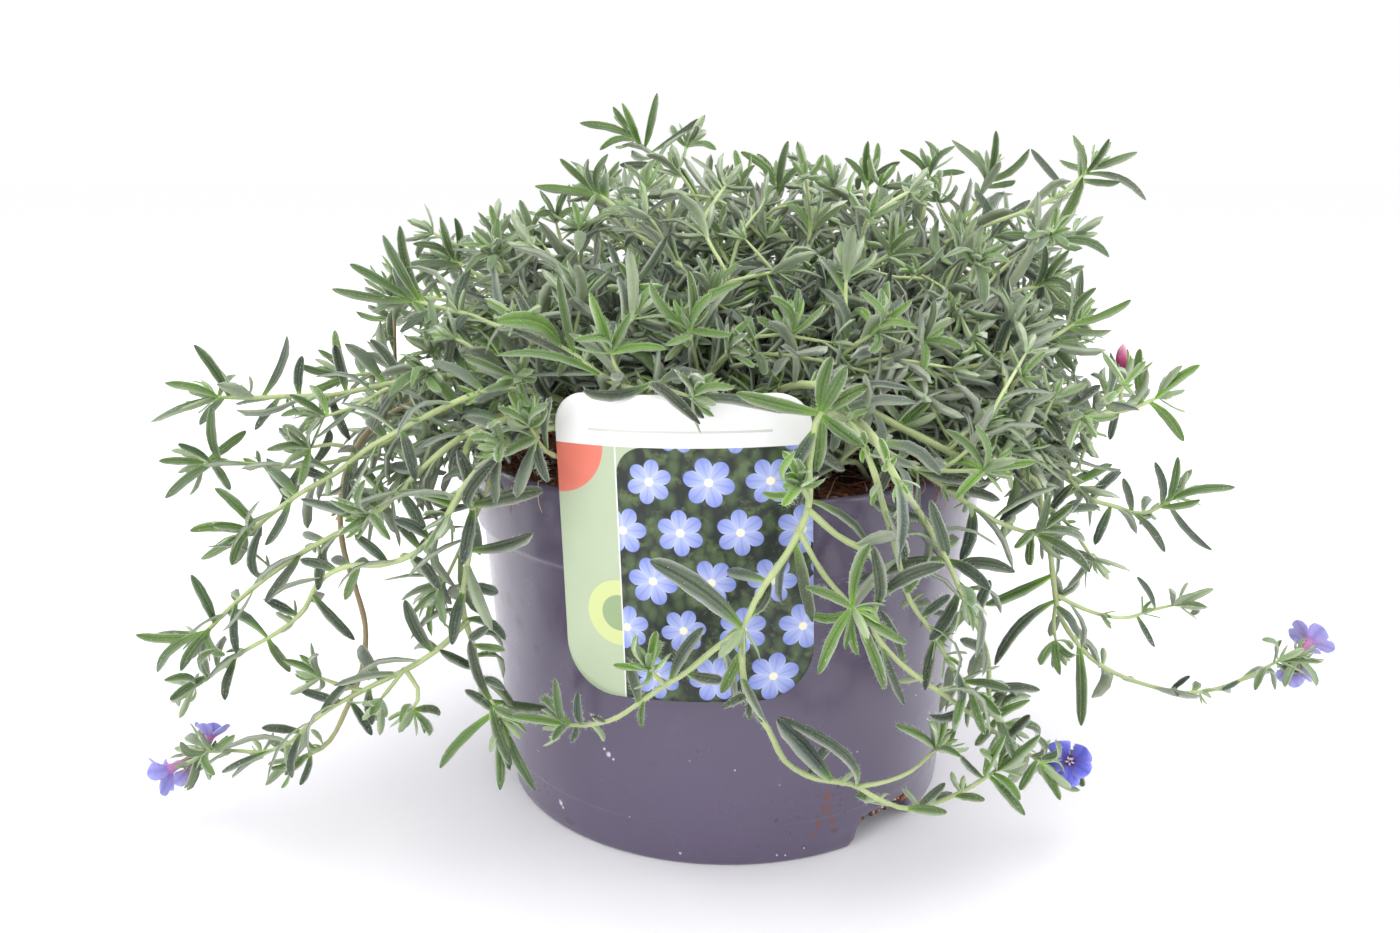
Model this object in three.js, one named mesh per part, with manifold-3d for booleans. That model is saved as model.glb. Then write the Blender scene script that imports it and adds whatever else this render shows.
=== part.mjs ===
// A trailing plant (lithodora) in its nursery pot.
// Millimetres, +Z up. Origin: middle of the underside of the pot. The front (label side) looks along -Y.
// The plant grows in the soil; every shoot is one grown piece: a stem, its side branches and its leaves.
import * as THREE from 'three';
import Module from 'manifold-3d';
import { mergeVertices } from 'three/addons/utils/BufferGeometryUtils.js';

const wasm = await Module();
wasm.setup();
const V = (a) => new THREE.Vector3(a[0], a[1], a[2]);

// Driving dimensions, in millimetres and degrees.
const GAP = 0.3;                 // left between pieces that touch
const POT = {
  height: 103, baseR: 67, collarZ: 81.4, collarFootR: 73.4, collarR: 75.2, wall: 1.2, floor: 1.5,
  ringZ: 12.4, segments: 48,
  notchAngles: [41, 161, -79],          // turned from the front towards the right
  notchWidth: 25, notchHeight: 8,
};
const SOIL = { top: 100.2, topR: 72.5 };
const CARD = {
  width: 61.8, height: 76.3, middle: 90.9, radius: 77.0, thick: 0.5, angle: -9.0, tilt: -1.7,
  topCorner: 8.5, footCorner: 13, tongueR: 73.4, tongueThick: 0.45, tongueFoot: 87, tongueWidth: 15,
};
const CROWN = { r: 7.0, h: 7.5 };
const LEAF_THICK = 1.0;
const FLOWER = { throatR: 1.5, tubeR: 0.8 };

// Open flowers. throat: middle of the open face; aim: where the face looks; size: petal length from the axis;
// tube: length of the tube behind the face; turn: petals turned about the axis.
const FLOWERS = {
  flower_left_1: { throat: [-151.4, -56, 22.2], aim: [-0.86, -0.28, -0.43], size: 6.5, tube: 7, turn: 0.2 },
  flower_left_2: { throat: [-151, -46, 16.9], aim: [-0.7, 0.15, -0.7], size: 5, tube: 4.5, turn: 0.5 },
  flower_left_3: { throat: [-146.7, -39, 23.9], aim: [0.1, 0.5, 0.85], size: 5.6, tube: 4.5, turn: 0.9 },
  flower_right_1: { throat: [172.5, -21, 44.6], aim: [0.7, 0.6, 0.4], size: 6.8, tube: 6, turn: 0.3 },
  flower_right_2: { throat: [168, -23.5, 36.7], aim: [0.15, 0.35, -0.9], size: 5.5, tube: 3.6, turn: 0.1 },
  flower_front: { throat: [90, -62, 28.2], aim: [0.15, -0.9, 0.35], size: 6.9, tube: 6, turn: 0.3 },
};
const BUD = { foot: [105.9, -31, 127], aim: [-0.05, 0, 1], length: 7.4, r: 1.5 };

// Shoots. A stem is a rod through its points; a side branch starts on stem number "on", at a share of its length.
// A leaf is [stem, share of the stem where its foot is, tip x, y, z, width, upper face x, y, z, bow].
const SHOOTS = [
  {
    name: 'shoot_left_ridge',
    stems: [
      { r: 0.72, sides: 4, steps: 8, points: [[-12, -32, 101.3], [-11.3, -38.3, 109.5], [-10.7, -46.3, 116.3], [-10.1, -55.9, 120.7], [-12.8, -65.1, 124.9], [-20.4, -69.4, 128.1], [-29.5, -66.1, 130.9], [-37.3, -61.3, 135.6], [-45.2, -55.2, 138.8], [-53.4, -48.6, 140], [-60.8, -41, 140.8], [-68.5, -34.1, 142.5], [-77.6, -28.8, 143.8], [-86.8, -24, 145.7]] },
      { on: 0, share: 0.4163, r: 0.5, sides: 3, steps: 2, points: [[-26.9, -69.8, 133.7], [-28.5, -69.4, 138.1]] },
      { on: 0, share: 0.3867, r: 0.5, sides: 3, steps: 2, points: [[-18.5, -75.2, 131.7], [-14.5, -81.2, 131.2], [-8.9, -81.9, 129.6]] },
      { on: 0, share: 0.8698, r: 0.5, sides: 3, steps: 2, points: [[-74.7, -28.8, 142.7], [-75.5, -23.7, 141.2], [-76.8, -19.2, 138.7]] },
      { on: 1, share: 0.8408, r: 0.5, sides: 3, steps: 2, points: [[-28.1, -68.4, 140.4], [-24.8, -65.1, 143.8], [-22.4, -62.4, 146]] },
      { on: 0, share: 0.1803, r: 0.5, sides: 3, steps: 2, points: [[-10.9, -50.6, 119.8], [-13.3, -47.5, 123.3], [-15.2, -45.5, 125.3]] },
    ],
    leaves: [
      [0, 0.9535, -86.7, -26.8, 164.9, 3.9, 0.17, -0.98, 0.05, 0.08],
      [0, 0.9777, -106.4, -25.4, 148.3, 3.9, 0.09, -0.76, 0.65, 0.086],
      [1, 0.985, -32.3, -75.4, 152.4, 3.9, 0.48, -0.85, -0.22, 0.079],
      [1, 0.9563, -15.1, -74.8, 139.5, 3.3, -0.34, -0.6, 0.73, 0.095],
      [1, 0.985, -22.1, -58.2, 139.2, 3.3, 0.29, -0.26, 0.92, 0.038],
      [2, 0.981, -4.3, -81.3, 134.8, 3.3, -0.23, -0.95, 0.2, 0.05],
    ],
  },
  {
    name: 'shoot_left_top',
    stems: [
      { r: 0.67, sides: 4, steps: 6, points: [[-22, -8, 101.3], [-22.9, -12.6, 111.5], [-24.2, -19.1, 120.8], [-26.3, -26.7, 129.1], [-33.2, -30.1, 137.1], [-42.7, -25.8, 141.6], [-52, -19.5, 143.9], [-60.8, -12.8, 146.7], [-70.2, -7.4, 150.3], [-79.5, -3, 155.2]] },
      { on: 0, share: 0.7222, r: 0.5, sides: 3, steps: 2, points: [[-62.2, -14.1, 151.3], [-64.6, -11.9, 159.1]] },
      { on: 0, share: 0.6665, r: 0.5, sides: 3, steps: 2, points: [[-55.6, -18.9, 144], [-59.2, -23.6, 142.5], [-62.6, -26.9, 140.2]] },
      { on: 0, share: 0.5163, r: 0.5, sides: 3, steps: 2, points: [[-43.4, -25.4, 140.4], [-46.9, -23, 136.8], [-50.2, -20.8, 132.9]] },
    ],
    leaves: [
      [0, 0.985, -87.7, -10.3, 159.3, 3.3, 0.66, -0.49, 0.57, 0.074],
      [0, 0.978, -80, -9, 166.6, 3.3, 0.27, -0.91, -0.33, 0.046],
      [1, 0.978, -58.4, -21.5, 167.5, 3.3, -0.9, -0.22, 0.38, 0.034],
    ],
  },
  {
    name: 'shoot_left_level',
    stems: [
      { r: 0.7, sides: 4, steps: 8, points: [[-28, -18, 101.3], [-30.7, -22.9, 110.8], [-34.7, -29.5, 119], [-39.9, -37.6, 124.8], [-48.3, -43.8, 128.6], [-59.1, -46.2, 129.5], [-70.2, -44.7, 128.3], [-81.3, -43.3, 126.9], [-92.2, -41.6, 124.7], [-103.2, -40.6, 122.3], [-114.3, -39.1, 121.7], [-125.5, -37.6, 121], [-136.7, -36, 120.8]] },
      { on: 0, share: 0.5486, r: 0.5, sides: 3, steps: 2, points: [[-85.3, -38.4, 127.3], [-94.2, -33.7, 126.9], [-103.4, -30, 125.2]] },
      { on: 0, share: 0.5862, r: 0.5, sides: 3, steps: 2, points: [[-87.4, -49.3, 125.2], [-94.2, -52.1, 121.6], [-102, -54, 119.2]] },
      { on: 0, share: 0.3869, r: 0.5, sides: 3, steps: 2, points: [[-60.7, -46.8, 130.8], [-65, -48, 135.9], [-69.3, -49.1, 138.4]] },
      { on: 0, share: 0.346, r: 0.5, sides: 3, steps: 2, points: [[-52.4, -44.9, 131.3], [-49.9, -41.9, 138.2], [-48.5, -39.9, 142.5]] },
      { on: 4, share: 0.2843, r: 0.5, sides: 3, steps: 2, points: [[-53, -43.3, 134], [-57.2, -41.4, 133.3], [-60.4, -39.7, 132.3]] },
      { on: 0, share: 0.5124, r: 0.5, sides: 3, steps: 2, points: [[-74.6, -45.6, 128.2], [-74.4, -50.8, 130.1], [-74.9, -54.8, 130.5]] },
      { on: 0, share: 0.1934, r: 0.5, sides: 3, steps: 2, points: [[-38.5, -33, 122.3], [-42.5, -28.9, 121.6], [-45.8, -26.2, 120.4]] },
    ],
    leaves: [
      [0, 0.9779, -154.3, -36.4, 114.1, 3.9, -0.19, -0.79, 0.59, 0.081],
      [0, 0.9779, -137.2, -44.9, 115.2, 3.3, 0.15, -0.59, 0.79, 0.097],
      [0, 0.9537, -141, -31.2, 131.6, 3.9, 0.14, -0.81, 0.57, 0.055],
      [1, 0.978, -106.9, -39.1, 133.9, 3.3, 0.91, -0.4, 0.03, 0.085],
      [2, 0.985, -109.4, -62.1, 121.2, 3.3, 0.65, -0.46, 0.61, 0.097],
      [2, 0.9779, -112.3, -44.3, 111.1, 3.3, -0.75, -0.61, 0.28, 0.094],
    ],
  },
  {
    name: 'shoot_left_mid',
    stems: [
      { r: 0.67, sides: 4, steps: 8, points: [[-33, -24, 101.3], [-37.7, -28.6, 109.7], [-43.8, -34.1, 116.8], [-51.5, -40.8, 120.6], [-60.2, -47, 122.6], [-70.3, -50.9, 121.1], [-80.1, -51.7, 116.9], [-88.9, -49.3, 111], [-98.8, -47.3, 106.8], [-109.3, -45.3, 104.6], [-119.9, -43, 103.6], [-130.6, -40.5, 104], [-141.2, -38, 103.5]] },
      { on: 0, share: 0.6361, r: 0.5, sides: 3, steps: 2, points: [[-100.1, -51.6, 111.6], [-106.4, -54, 111.3]] },
      { on: 0, share: 0.3881, r: 0.5, sides: 3, steps: 2, points: [[-73.8, -51.5, 118.8], [-79, -50.5, 112.6], [-84.2, -50.1, 105.3]] },
      { on: 0, share: 0.3046, r: 0.5, sides: 3, steps: 2, points: [[-64.7, -46, 123.1], [-72.1, -36.3, 124.3], [-79.1, -29.5, 123]] },
      { on: 3, share: 0.7851, r: 0.5, sides: 3, steps: 2, points: [[-76.5, -32.7, 125.1], [-77.3, -35.4, 130.3], [-78.3, -37.1, 133.3]] },
    ],
    leaves: [
      [0, 0.985, -149.5, -43.8, 105.3, 3.3, 0.45, -0.58, 0.68, 0.056],
      [0, 0.978, -129.5, -48.8, 98.8, 3.3, -0.13, -0.52, 0.85, 0.078],
      [0, 0.954, -133.2, -45.6, 120.3, 3.9, -0.07, -0.94, -0.34, 0.037],
      [1, 0.985, -113.5, -62.4, 112.8, 3.3, 0.62, -0.4, 0.68, 0.037],
    ],
  },
  {
    name: 'shoot_left_low_1',
    stems: [
      { r: 0.68, sides: 4, steps: 8, points: [[-28, -34, 101.3], [-31.9, -38.6, 110.1], [-37, -43.9, 118], [-43.9, -50.4, 123.3], [-52, -56.7, 126.8], [-62, -60.8, 126.3], [-71.6, -61.5, 122.3], [-81.1, -60.1, 117.3], [-90.4, -58.3, 111.9], [-99, -56.8, 105.4], [-108.4, -55.5, 100.1], [-117.2, -53.8, 93.9], [-125.5, -52, 87.3]] },
      { on: 0, share: 0.1515, r: 0.5, sides: 3, steps: 2, points: [[-38.3, -45.8, 120.9], [-38.7, -48.5, 126.7], [-39.6, -51.1, 130.4]] },
      { on: 0, share: 0.2074, r: 0.5, sides: 3, steps: 2, points: [[-42.9, -47.6, 121.6], [-46.1, -43.9, 120], [-49, -41.3, 118]] },
    ],
    leaves: [
      [0, 0.985, -136.6, -58.3, 90.7, 3.9, 0.46, -0.66, 0.59, 0.068],
      [0, 0.9782, -129.2, -61.5, 93.3, 3.3, 0.81, -0.28, 0.52, 0.044],
    ],
  },
  {
    name: 'shoot_left_low_2',
    stems: [
      { r: 0.72, sides: 4, steps: 9, points: [[-22, -42, 101.3], [-27.2, -46.6, 109.9], [-34.3, -51.8, 116.6], [-43.4, -57.6, 119.9], [-53.3, -62.8, 120.7], [-63.6, -66.1, 117.6], [-72.5, -65.8, 111], [-80.6, -63.5, 103.4], [-89, -61.7, 96.1], [-98.4, -59.1, 90.6], [-108, -56.9, 85.2], [-117.1, -54.9, 79], [-125.9, -52.9, 72.2], [-134.2, -50.9, 64.9], [-142, -48, 57.4]] },
      { on: 0, share: 0.5178, r: 0.5, sides: 3, steps: 2, points: [[-85, -65.3, 98.8], [-88, -68, 97.9]] },
    ],
    leaves: [
      [0, 0.985, -158.9, -42.4, 54.1, 3.9, -0.38, -0.65, 0.66, 0.075],
      [0, 0.9541, -138.9, -55.8, 78, 3.9, 0.51, -0.83, -0.25, 0.099],
      [0, 0.985, -155.6, -55.1, 61.1, 3.9, 0.41, -0.64, 0.66, 0.049],
      [0, 0.9661, -144.6, -56, 51.2, 3.9, 0.07, -0.85, 0.52, 0.043],
      [1, 0.9657, -84.6, -80.1, 110, 3.3, -0.66, -0.61, -0.44, 0.077],
      [1, 0.985, -94.1, -77, 104.3, 3.3, 0.88, -0.39, 0.28, 0.09],
    ],
  },
  {
    name: 'shoot_left_low_3',
    stems: [
      { r: 0.67, sides: 4, steps: 10, points: [[-16, -48, 101.3], [-21.3, -52.6, 109.1], [-28.9, -57.2, 115.5], [-37.8, -60.1, 118.2], [-48, -67.1, 118.2], [-56.8, -71.3, 113.6], [-63.7, -73.2, 106.1], [-69.2, -72.1, 97.2], [-76.2, -69.8, 89.3], [-85.5, -66.8, 84.8], [-95.8, -64, 83.3], [-104.3, -60.8, 77.8], [-109.9, -58.5, 69.1], [-118.1, -56.5, 62.2], [-127.2, -54.7, 56.7], [-135.7, -52.9, 50.3], [-144.4, -51, 44.2]] },
      { on: 0, share: 0.1618, r: 0.5, sides: 3, steps: 2, points: [[-34.8, -62, 118.7], [-32, -61.7, 123.8], [-30.4, -61.7, 127]] },
    ],
    leaves: [
      [0, 0.954, -147.2, -58.3, 44, 3.9, 0.11, -0.72, 0.69, 0.095],
      [0, 0.978, -152.9, -42.4, 34.6, 3.3, -0.77, -0.54, 0.34, 0.074],
      [0, 0.966, -131.8, -62.6, 60.1, 3.3, -0.87, -0.48, 0.14, 0.072],
    ],
  },
  {
    name: 'shoot_left_woody',
    stems: [
      { r: 0.72, sides: 4, steps: 10, points: [[-42, -12, 101.3], [-49.6, -13.7, 109.3], [-58.6, -15.6, 115.7], [-69.5, -18, 117.8], [-80.5, -20.4, 117.9], [-91.1, -23, 114.9], [-100.1, -25.4, 108.5], [-105.6, -27.5, 99.1], [-107.7, -29.8, 88.3], [-106.3, -34.2, 78], [-102.8, -37.5, 67.7], [-99.7, -41.2, 57.5], [-100.3, -45.2, 46.9], [-104, -49.4, 37.1], [-109.4, -51.6, 27.7], [-119, -52, 22.6]] },
      { on: 0, share: 0.2558, r: 0.5, sides: 3, steps: 2, points: [[-91.2, -17.7, 116.3], [-99.2, -1.4, 115], [-107.7, 10.9, 109.9]] },
      { on: 0, share: 0.1661, r: 0.5, sides: 3, steps: 2, points: [[-72.1, -18.2, 117.4], [-80.4, -18.7, 115.4], [-88.3, -19.3, 111.9]] },
      { on: 2, share: 0.5439, r: 0.5, sides: 3, steps: 2, points: [[-90.8, -16.8, 109.4], [-98.6, -8.7, 98.1], [-107.2, -2.4, 84.4]] },
    ],
    leaves: [
      [0, 0.9671, -116.2, -55.9, 17.6, 2.9, -0.05, -0.87, 0.49, 0.06],
      [0, 0.9545, -121.2, -39.9, 24, 3.3, -0.48, -0.24, 0.85, 0.064],
      [0, 0.985, -129.3, -42.4, 23.8, 3.3, -0.33, -0.45, 0.83, 0.082],
    ],
  },
  {
    name: 'shoot_left_front',
    stems: [
      { r: 0.74, sides: 4, steps: 7, points: [[-33, -36, 101.3], [-38, -40, 109.4], [-44.5, -45.3, 115.9], [-52.2, -51.5, 119.5], [-59.6, -58.6, 119.3], [-64.3, -65.2, 113.1], [-62.4, -69.3, 103.6], [-63.2, -69.2, 93.4], [-65.2, -68, 83.1], [-66.9, -66.3, 73], [-64.9, -66, 62.6], [-63, -66.2, 52.2], [-58.1, -68, 43.2]] },
      { on: 0, share: 0.773, r: 0.58, sides: 3, steps: 6, points: [[-72.5, -66.1, 63], [-79.8, -65.7, 57.6], [-87.7, -64.8, 53.2], [-95.6, -64, 48.8], [-103.4, -63.2, 44.1], [-110.2, -61.3, 38.4], [-116.7, -60, 32.2], [-124.8, -57.8, 28.6], [-133.7, -56.1, 28.1], [-142.5, -54.4, 26.7]] },
      { on: 1, share: 0.242, r: 0.5, sides: 3, steps: 2, points: [[-79.3, -66.3, 50.1], [-81, -68, 45.7]] },
      { on: 1, share: 0.242, r: 0.5, sides: 3, steps: 2, points: [[-86.7, -66.1, 51.2], [-89.5, -66, 47.8]] },
      { on: 1, share: 0.3861, r: 0.5, sides: 3, steps: 2, points: [[-101.7, -62.1, 50.5], [-106.8, -60, 51.4]] },
      { on: 0, share: 0.305, r: 0.5, sides: 3, steps: 2, points: [[-61.7, -58.2, 118.8], [-67.3, -55.3, 117.1], [-72.3, -53.6, 114.2]] },
      { on: 0, share: 0.1526, r: 0.5, sides: 3, steps: 2, points: [[-54.4, -52.4, 115.4], [-63.9, -57.2, 95.2], [-73.2, -62.4, 76.3]] },
      { on: 6, share: 0.1831, r: 0.5, sides: 3, steps: 2, points: [[-55.4, -51.8, 115], [-58.3, -49, 113.9], [-61, -47.1, 111.9]] },
    ],
    leaves: [
      [0, 0.978, -74.9, -67.5, 29.3, 3.9, -0.2, -0.96, 0.19, 0.096],
      [0, 0.9044, -56.6, -70, 52.5, 3.3, -0.23, -0.61, 0.76, 0.06],
      [2, 0.9812, -76.8, -56.4, 38.7, 3.3, 0.93, -0.11, 0.35, 0.086],
      [2, 0.9709, -73.9, -78.6, 44.7, 3.3, -0.34, -0.33, 0.88, 0.056],
      [4, 0.9722, -114.2, -47.5, 41.6, 3.3, -0.74, 0.06, 0.67, 0.044],
      [4, 0.9625, -102.1, -72.1, 63, 3.3, -0.79, 0.27, 0.56, 0.06],
    ],
  },
  {
    name: 'shoot_top_left',
    stems: [
      { r: 0.67, sides: 4, steps: 6, points: [[-10, 18, 101.3], [-10.8, 16.6, 111.6], [-11.6, 14.7, 122.1], [-12.7, 11.2, 132.2], [-13.9, 8.2, 142.4], [-15.1, 7.5, 153], [-16.3, 8.9, 163.5], [-17.5, 13.2, 173.2], [-20.5, 18.6, 181.9], [-27.4, 22, 188.4]] },
      { on: 0, share: 0.754, r: 0.5, sides: 3, steps: 2, points: [[-14.2, 15.2, 179.2], [-11.2, 20, 186.6]] },
      { on: 0, share: 0.558, r: 0.5, sides: 3, steps: 2, points: [[-15.2, 12.1, 161.2], [-12.1, 27.4, 162.8], [-9.9, 39.6, 162.8]] },
    ],
    leaves: [
      [0, 0.985, -37.1, 14.2, 185.1, 3.3, 0.21, -0.58, 0.79, 0.079],
      [0, 0.9559, -20.1, 14.1, 201, 3.9, -0.61, -0.78, -0.17, 0.043],
      [1, 0.9665, -3, 9.3, 185, 3.3, -0.31, -0.35, 0.88, 0.1],
    ],
  },
  {
    name: 'shoot_top_fan',
    stems: [
      { r: 0.67, sides: 4, steps: 6, points: [[-8, -20, 101.3], [-6.9, -24.2, 111.6], [-5.7, -29.1, 121.9], [-3.9, -35.4, 131.4], [-4.5, -38.8, 142.1], [-9.2, -35.8, 151.8], [-15.9, -28.4, 157.4], [-24, -21.8, 162.1], [-29.9, -14.8, 168.8], [-37.6, -8, 173.9]] },
      { on: 0, share: 0.7892, r: 0.5, sides: 3, steps: 2, points: [[-23.9, -20.2, 168.4], [-22.3, -20, 174]] },
      { on: 0, share: 0.3701, r: 0.5, sides: 3, steps: 2, points: [[-3.9, -39.2, 140.1], [-4.4, -42.1, 145.8], [-4.8, -44.6, 149.6]] },
      { on: 2, share: 0.7835, r: 0.5, sides: 3, steps: 2, points: [[-2.5, -44.4, 150.8], [5.8, -42.9, 153.2], [12.2, -42.2, 154.3]] },
      { on: 0, share: 0.609, r: 0.5, sides: 3, steps: 2, points: [[-15.6, -30.6, 158.4], [-18.7, -33.5, 164.6], [-21.6, -35.2, 168.4]] },
      { on: 3, share: 0.1997, r: 0.5, sides: 3, steps: 2, points: [[-1.3, -43.6, 154.3], [-4.5, -39.3, 159.9], [-6.4, -35.9, 163.5]] },
      { on: 5, share: 0.9104, r: 0.5, sides: 3, steps: 2, points: [[-6.6, -32.5, 166.8], [-3.1, -27.5, 172.1], [-0.8, -23, 175.2]] },
    ],
    leaves: [
      [0, 0.9778, -37.5, -18.9, 182, 3.3, -0.69, 0.55, 0.47, 0.06],
      [0, 0.985, -45, 1.9, 168.2, 3.3, -0.77, -0.31, 0.56, 0.046],
      [0, 0.985, -45.5, -13.8, 182.1, 3.3, 0.66, -0.72, 0.22, 0.04],
      [0, 0.9778, -31.1, 2.3, 176.5, 3.3, 0.1, -0.34, 0.94, 0.05],
      [1, 0.9637, -16.6, -32.2, 175.4, 3.3, -0.39, -0.05, 0.92, 0.061],
      [1, 0.9508, -28.2, -31.8, 174.1, 3.3, 0.52, -0.2, 0.83, 0.059],
    ],
  },
  {
    name: 'shoot_top_left_2',
    stems: [
      { r: 0.67, sides: 4, steps: 5, points: [[-18, 4, 101.3], [-18.2, 0, 110.7], [-18.6, -4.7, 120], [-18.9, -11.4, 128.1], [-19.9, -18.4, 135.8], [-24.8, -22.1, 144], [-32.5, -18.5, 148.5], [-41.4, -13.4, 150.5], [-49.5, -8.3, 154.7], [-57.4, -4, 160]] },
      { on: 0, share: 0.8093, r: 0.5, sides: 3, steps: 2, points: [[-46.2, -8.8, 158.5], [-48.3, -5, 165.1]] },
      { on: 0, share: 0.7189, r: 0.5, sides: 3, steps: 2, points: [[-40.4, -15.5, 152.2], [-39.7, -20.5, 159.8], [-40, -24.1, 164.4]] },
      { on: 0, share: 0.5073, r: 0.5, sides: 3, steps: 2, points: [[-22, -23.4, 142.2], [-16.7, -27.7, 140.9], [-12.9, -31.4, 139.2]] },
    ],
    leaves: [
      [0, 0.9657, -68.1, 0.2, 160.4, 3.3, -0.19, -0.7, 0.69, 0.059],
      [0, 0.985, -51.8, 7.5, 159.4, 3.3, 0.29, -0.11, 0.95, 0.071],
      [1, 0.985, -51.2, -14.3, 173.9, 3.3, 0.97, -0.09, 0.22, 0.037],
    ],
  },
  {
    name: 'shoot_top_mid',
    stems: [
      { r: 0.67, sides: 4, steps: 5, points: [[4, 22, 101.3], [5.8, 19.9, 112.2], [8.3, 16.7, 123], [11.6, 11.8, 132.8], [14.5, 9.3, 143.6], [16.4, 10.4, 154.9], [16.5, 15.9, 165], [15.8, 22, 174.7]] },
      { on: 0, share: 0.8137, r: 0.5, sides: 3, steps: 2, points: [[10.6, 14, 167.7], [4.9, 14, 173.6]] },
    ],
    leaves: [
      [0, 0.966, 18.3, 14.2, 187.6, 3.9, -0.47, -0.84, -0.28, 0.063],
      [0, 0.985, 11.5, 9, 170.8, 3.3, 0.1, -0.28, 0.95, 0.098],
      [1, 0.985, -3.3, 6.1, 180.7, 3.3, 0.78, -0.54, 0.3, 0.099],
      [1, 0.978, 2.9, 20.3, 185.2, 3.3, -0.16, -0.88, 0.44, 0.079],
      [1, 0.954, 8.1, 3.4, 180.7, 3.3, -0.97, -0.09, 0.23, 0.058],
      [1, 0.966, -1.9, 2.5, 172.4, 3.3, 0.26, -0.23, 0.94, 0.035],
    ],
  },
  {
    name: 'shoot_top_front',
    stems: [
      { r: 0.67, sides: 4, steps: 4, points: [[10, -10, 101.3], [11.7, -12, 112], [14.4, -14.6, 122.6], [17.5, -16.7, 133.2], [20.1, -16, 144.1], [21.7, -12.7, 154.7], [24, -8, 164.6]] },
      { on: 0, share: 0.8888, r: 0.5, sides: 3, steps: 2, points: [[23.1, -11.2, 165.3], [21.2, -20.2, 172.9], [19.9, -26.7, 177.7]] },
    ],
    leaves: [
      [0, 0.966, 30.9, -16.8, 170, 3.3, -0.82, -0.36, 0.44, 0.042],
      [0, 0.985, 31.6, 3.4, 161.1, 3.3, 0.55, -0.15, 0.82, 0.038],
    ],
  },
  {
    name: 'shoot_top_centre',
    stems: [
      { r: 0.67, sides: 4, steps: 4, points: [[0, -2, 108.8], [1.6, -5.3, 113], [3.7, -9.6, 121.7], [6.1, -14.6, 131.4], [6.1, -14.5, 142.4], [2.9, -8, 150.6], [-2.7, -2, 158.2]] },
      { on: 0, share: 0.8135, r: 0.5, sides: 3, steps: 2, points: [[7.7, -6.6, 155.5], [11.7, -4, 160.6]] },
      { on: 0, share: 0.8751, r: 0.5, sides: 3, steps: 2, points: [[-3.9, -1.8, 161], [-9.1, -1.5, 172.2], [-13.9, -0.4, 179.3]] },
      { on: 2, share: 0.4584, r: 0.5, sides: 3, steps: 2, points: [[-6, -1.6, 169.7], [-1.2, -3, 175.3], [2.1, -4, 179.1]] },
    ],
    leaves: [
      [0, 0.9753, -0.4, 4.3, 169.5, 3.3, -0.18, -0.84, 0.51, 0.038],
      [0, 0.9483, -10.4, -12.6, 160.5, 3.3, 0.62, -0.29, 0.73, 0.039],
      [0, 0.9618, 4.8, -12.2, 164.5, 3.3, -0.88, -0.28, 0.39, 0.051],
      [1, 0.9786, 15.8, 7.1, 166.6, 3.3, 0.18, -0.53, 0.83, 0.045],
      [1, 0.985, 7.4, -14.4, 168.6, 3.3, 0.93, -0.09, 0.37, 0.084],
      [1, 0.9552, 7.1, 8.3, 160.8, 3.3, -0.16, -0.11, 0.98, 0.09],
    ],
  },
  {
    name: 'shoot_top_right',
    stems: [
      { r: 0.67, sides: 4, steps: 5, points: [[14, 28, 101.3], [17.5, 26.7, 111.4], [21.7, 25, 121.4], [27.6, 21.6, 130], [33.7, 18.6, 138.6], [38.9, 18.4, 148.2], [42.7, 21, 158.2], [43.7, 27, 167.3], [44.8, 32, 177.1]] },
      { on: 0, share: 0.8172, r: 0.5, sides: 3, steps: 2, points: [[38.1, 25.8, 168.3], [33.2, 28, 173.5]] },
      { on: 0, share: 0.8948, r: 0.5, sides: 3, steps: 2, points: [[43.9, 32.6, 172.8], [42.2, 40.9, 172.5], [40.9, 47.9, 171.4]] },
    ],
    leaves: [
      [0, 0.9535, 36.4, 24, 182.9, 3.3, 0.75, -0.61, 0.23, 0.041],
      [0, 0.9657, 53.4, 25.2, 181.8, 3.3, -0.71, -0.56, 0.43, 0.059],
      [0, 0.985, 43.4, 25.1, 187.9, 3.3, 0, -0.87, -0.48, 0.098],
      [0, 0.9778, 48.1, 36.3, 187.7, 3.3, -0.19, -0.89, 0.42, 0.09],
      [0, 0.985, 43.5, 44.5, 173.3, 3.3, -0.31, 0.19, 0.93, 0.041],
      [1, 0.9542, 24.7, 16.9, 173.6, 3.3, 0.33, -0.22, 0.92, 0.035],
    ],
  },
  {
    name: 'shoot_top_right_2',
    stems: [
      { r: 0.67, sides: 4, steps: 5, points: [[26, 28, 101.3], [30.2, 27.5, 111.6], [35.4, 26.5, 121.7], [42.4, 24.2, 130.3], [49.4, 22.6, 139.1], [55.5, 23, 148.7], [60, 25.6, 158.8], [62.6, 30, 169], [64.4, 34, 179.5]] },
      { on: 0, share: 0.6863, r: 0.5, sides: 3, steps: 2, points: [[64.4, 26.5, 157.7], [76.2, 29, 148], [86.2, 31.4, 139]] },
      { on: 1, share: 0.4166, r: 0.5, sides: 3, steps: 2, points: [[74.8, 28.6, 152.3], [80.5, 29.1, 157.8], [85.6, 29.6, 160.1]] },
      { on: 1, share: 0.1643, r: 0.5, sides: 3, steps: 2, points: [[66.8, 29.7, 157.7], [64.8, 37.8, 158.4], [64.2, 44.4, 157.3]] },
    ],
    leaves: [
      [0, 0.985, 69.5, 44.9, 185.7, 3.3, -0.03, -0.52, 0.85, 0.058],
      [0, 0.9659, 53.6, 27.7, 185.4, 3.3, 0.65, -0.67, 0.36, 0.076],
    ],
  },
  {
    name: 'shoot_top_right_3',
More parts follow.
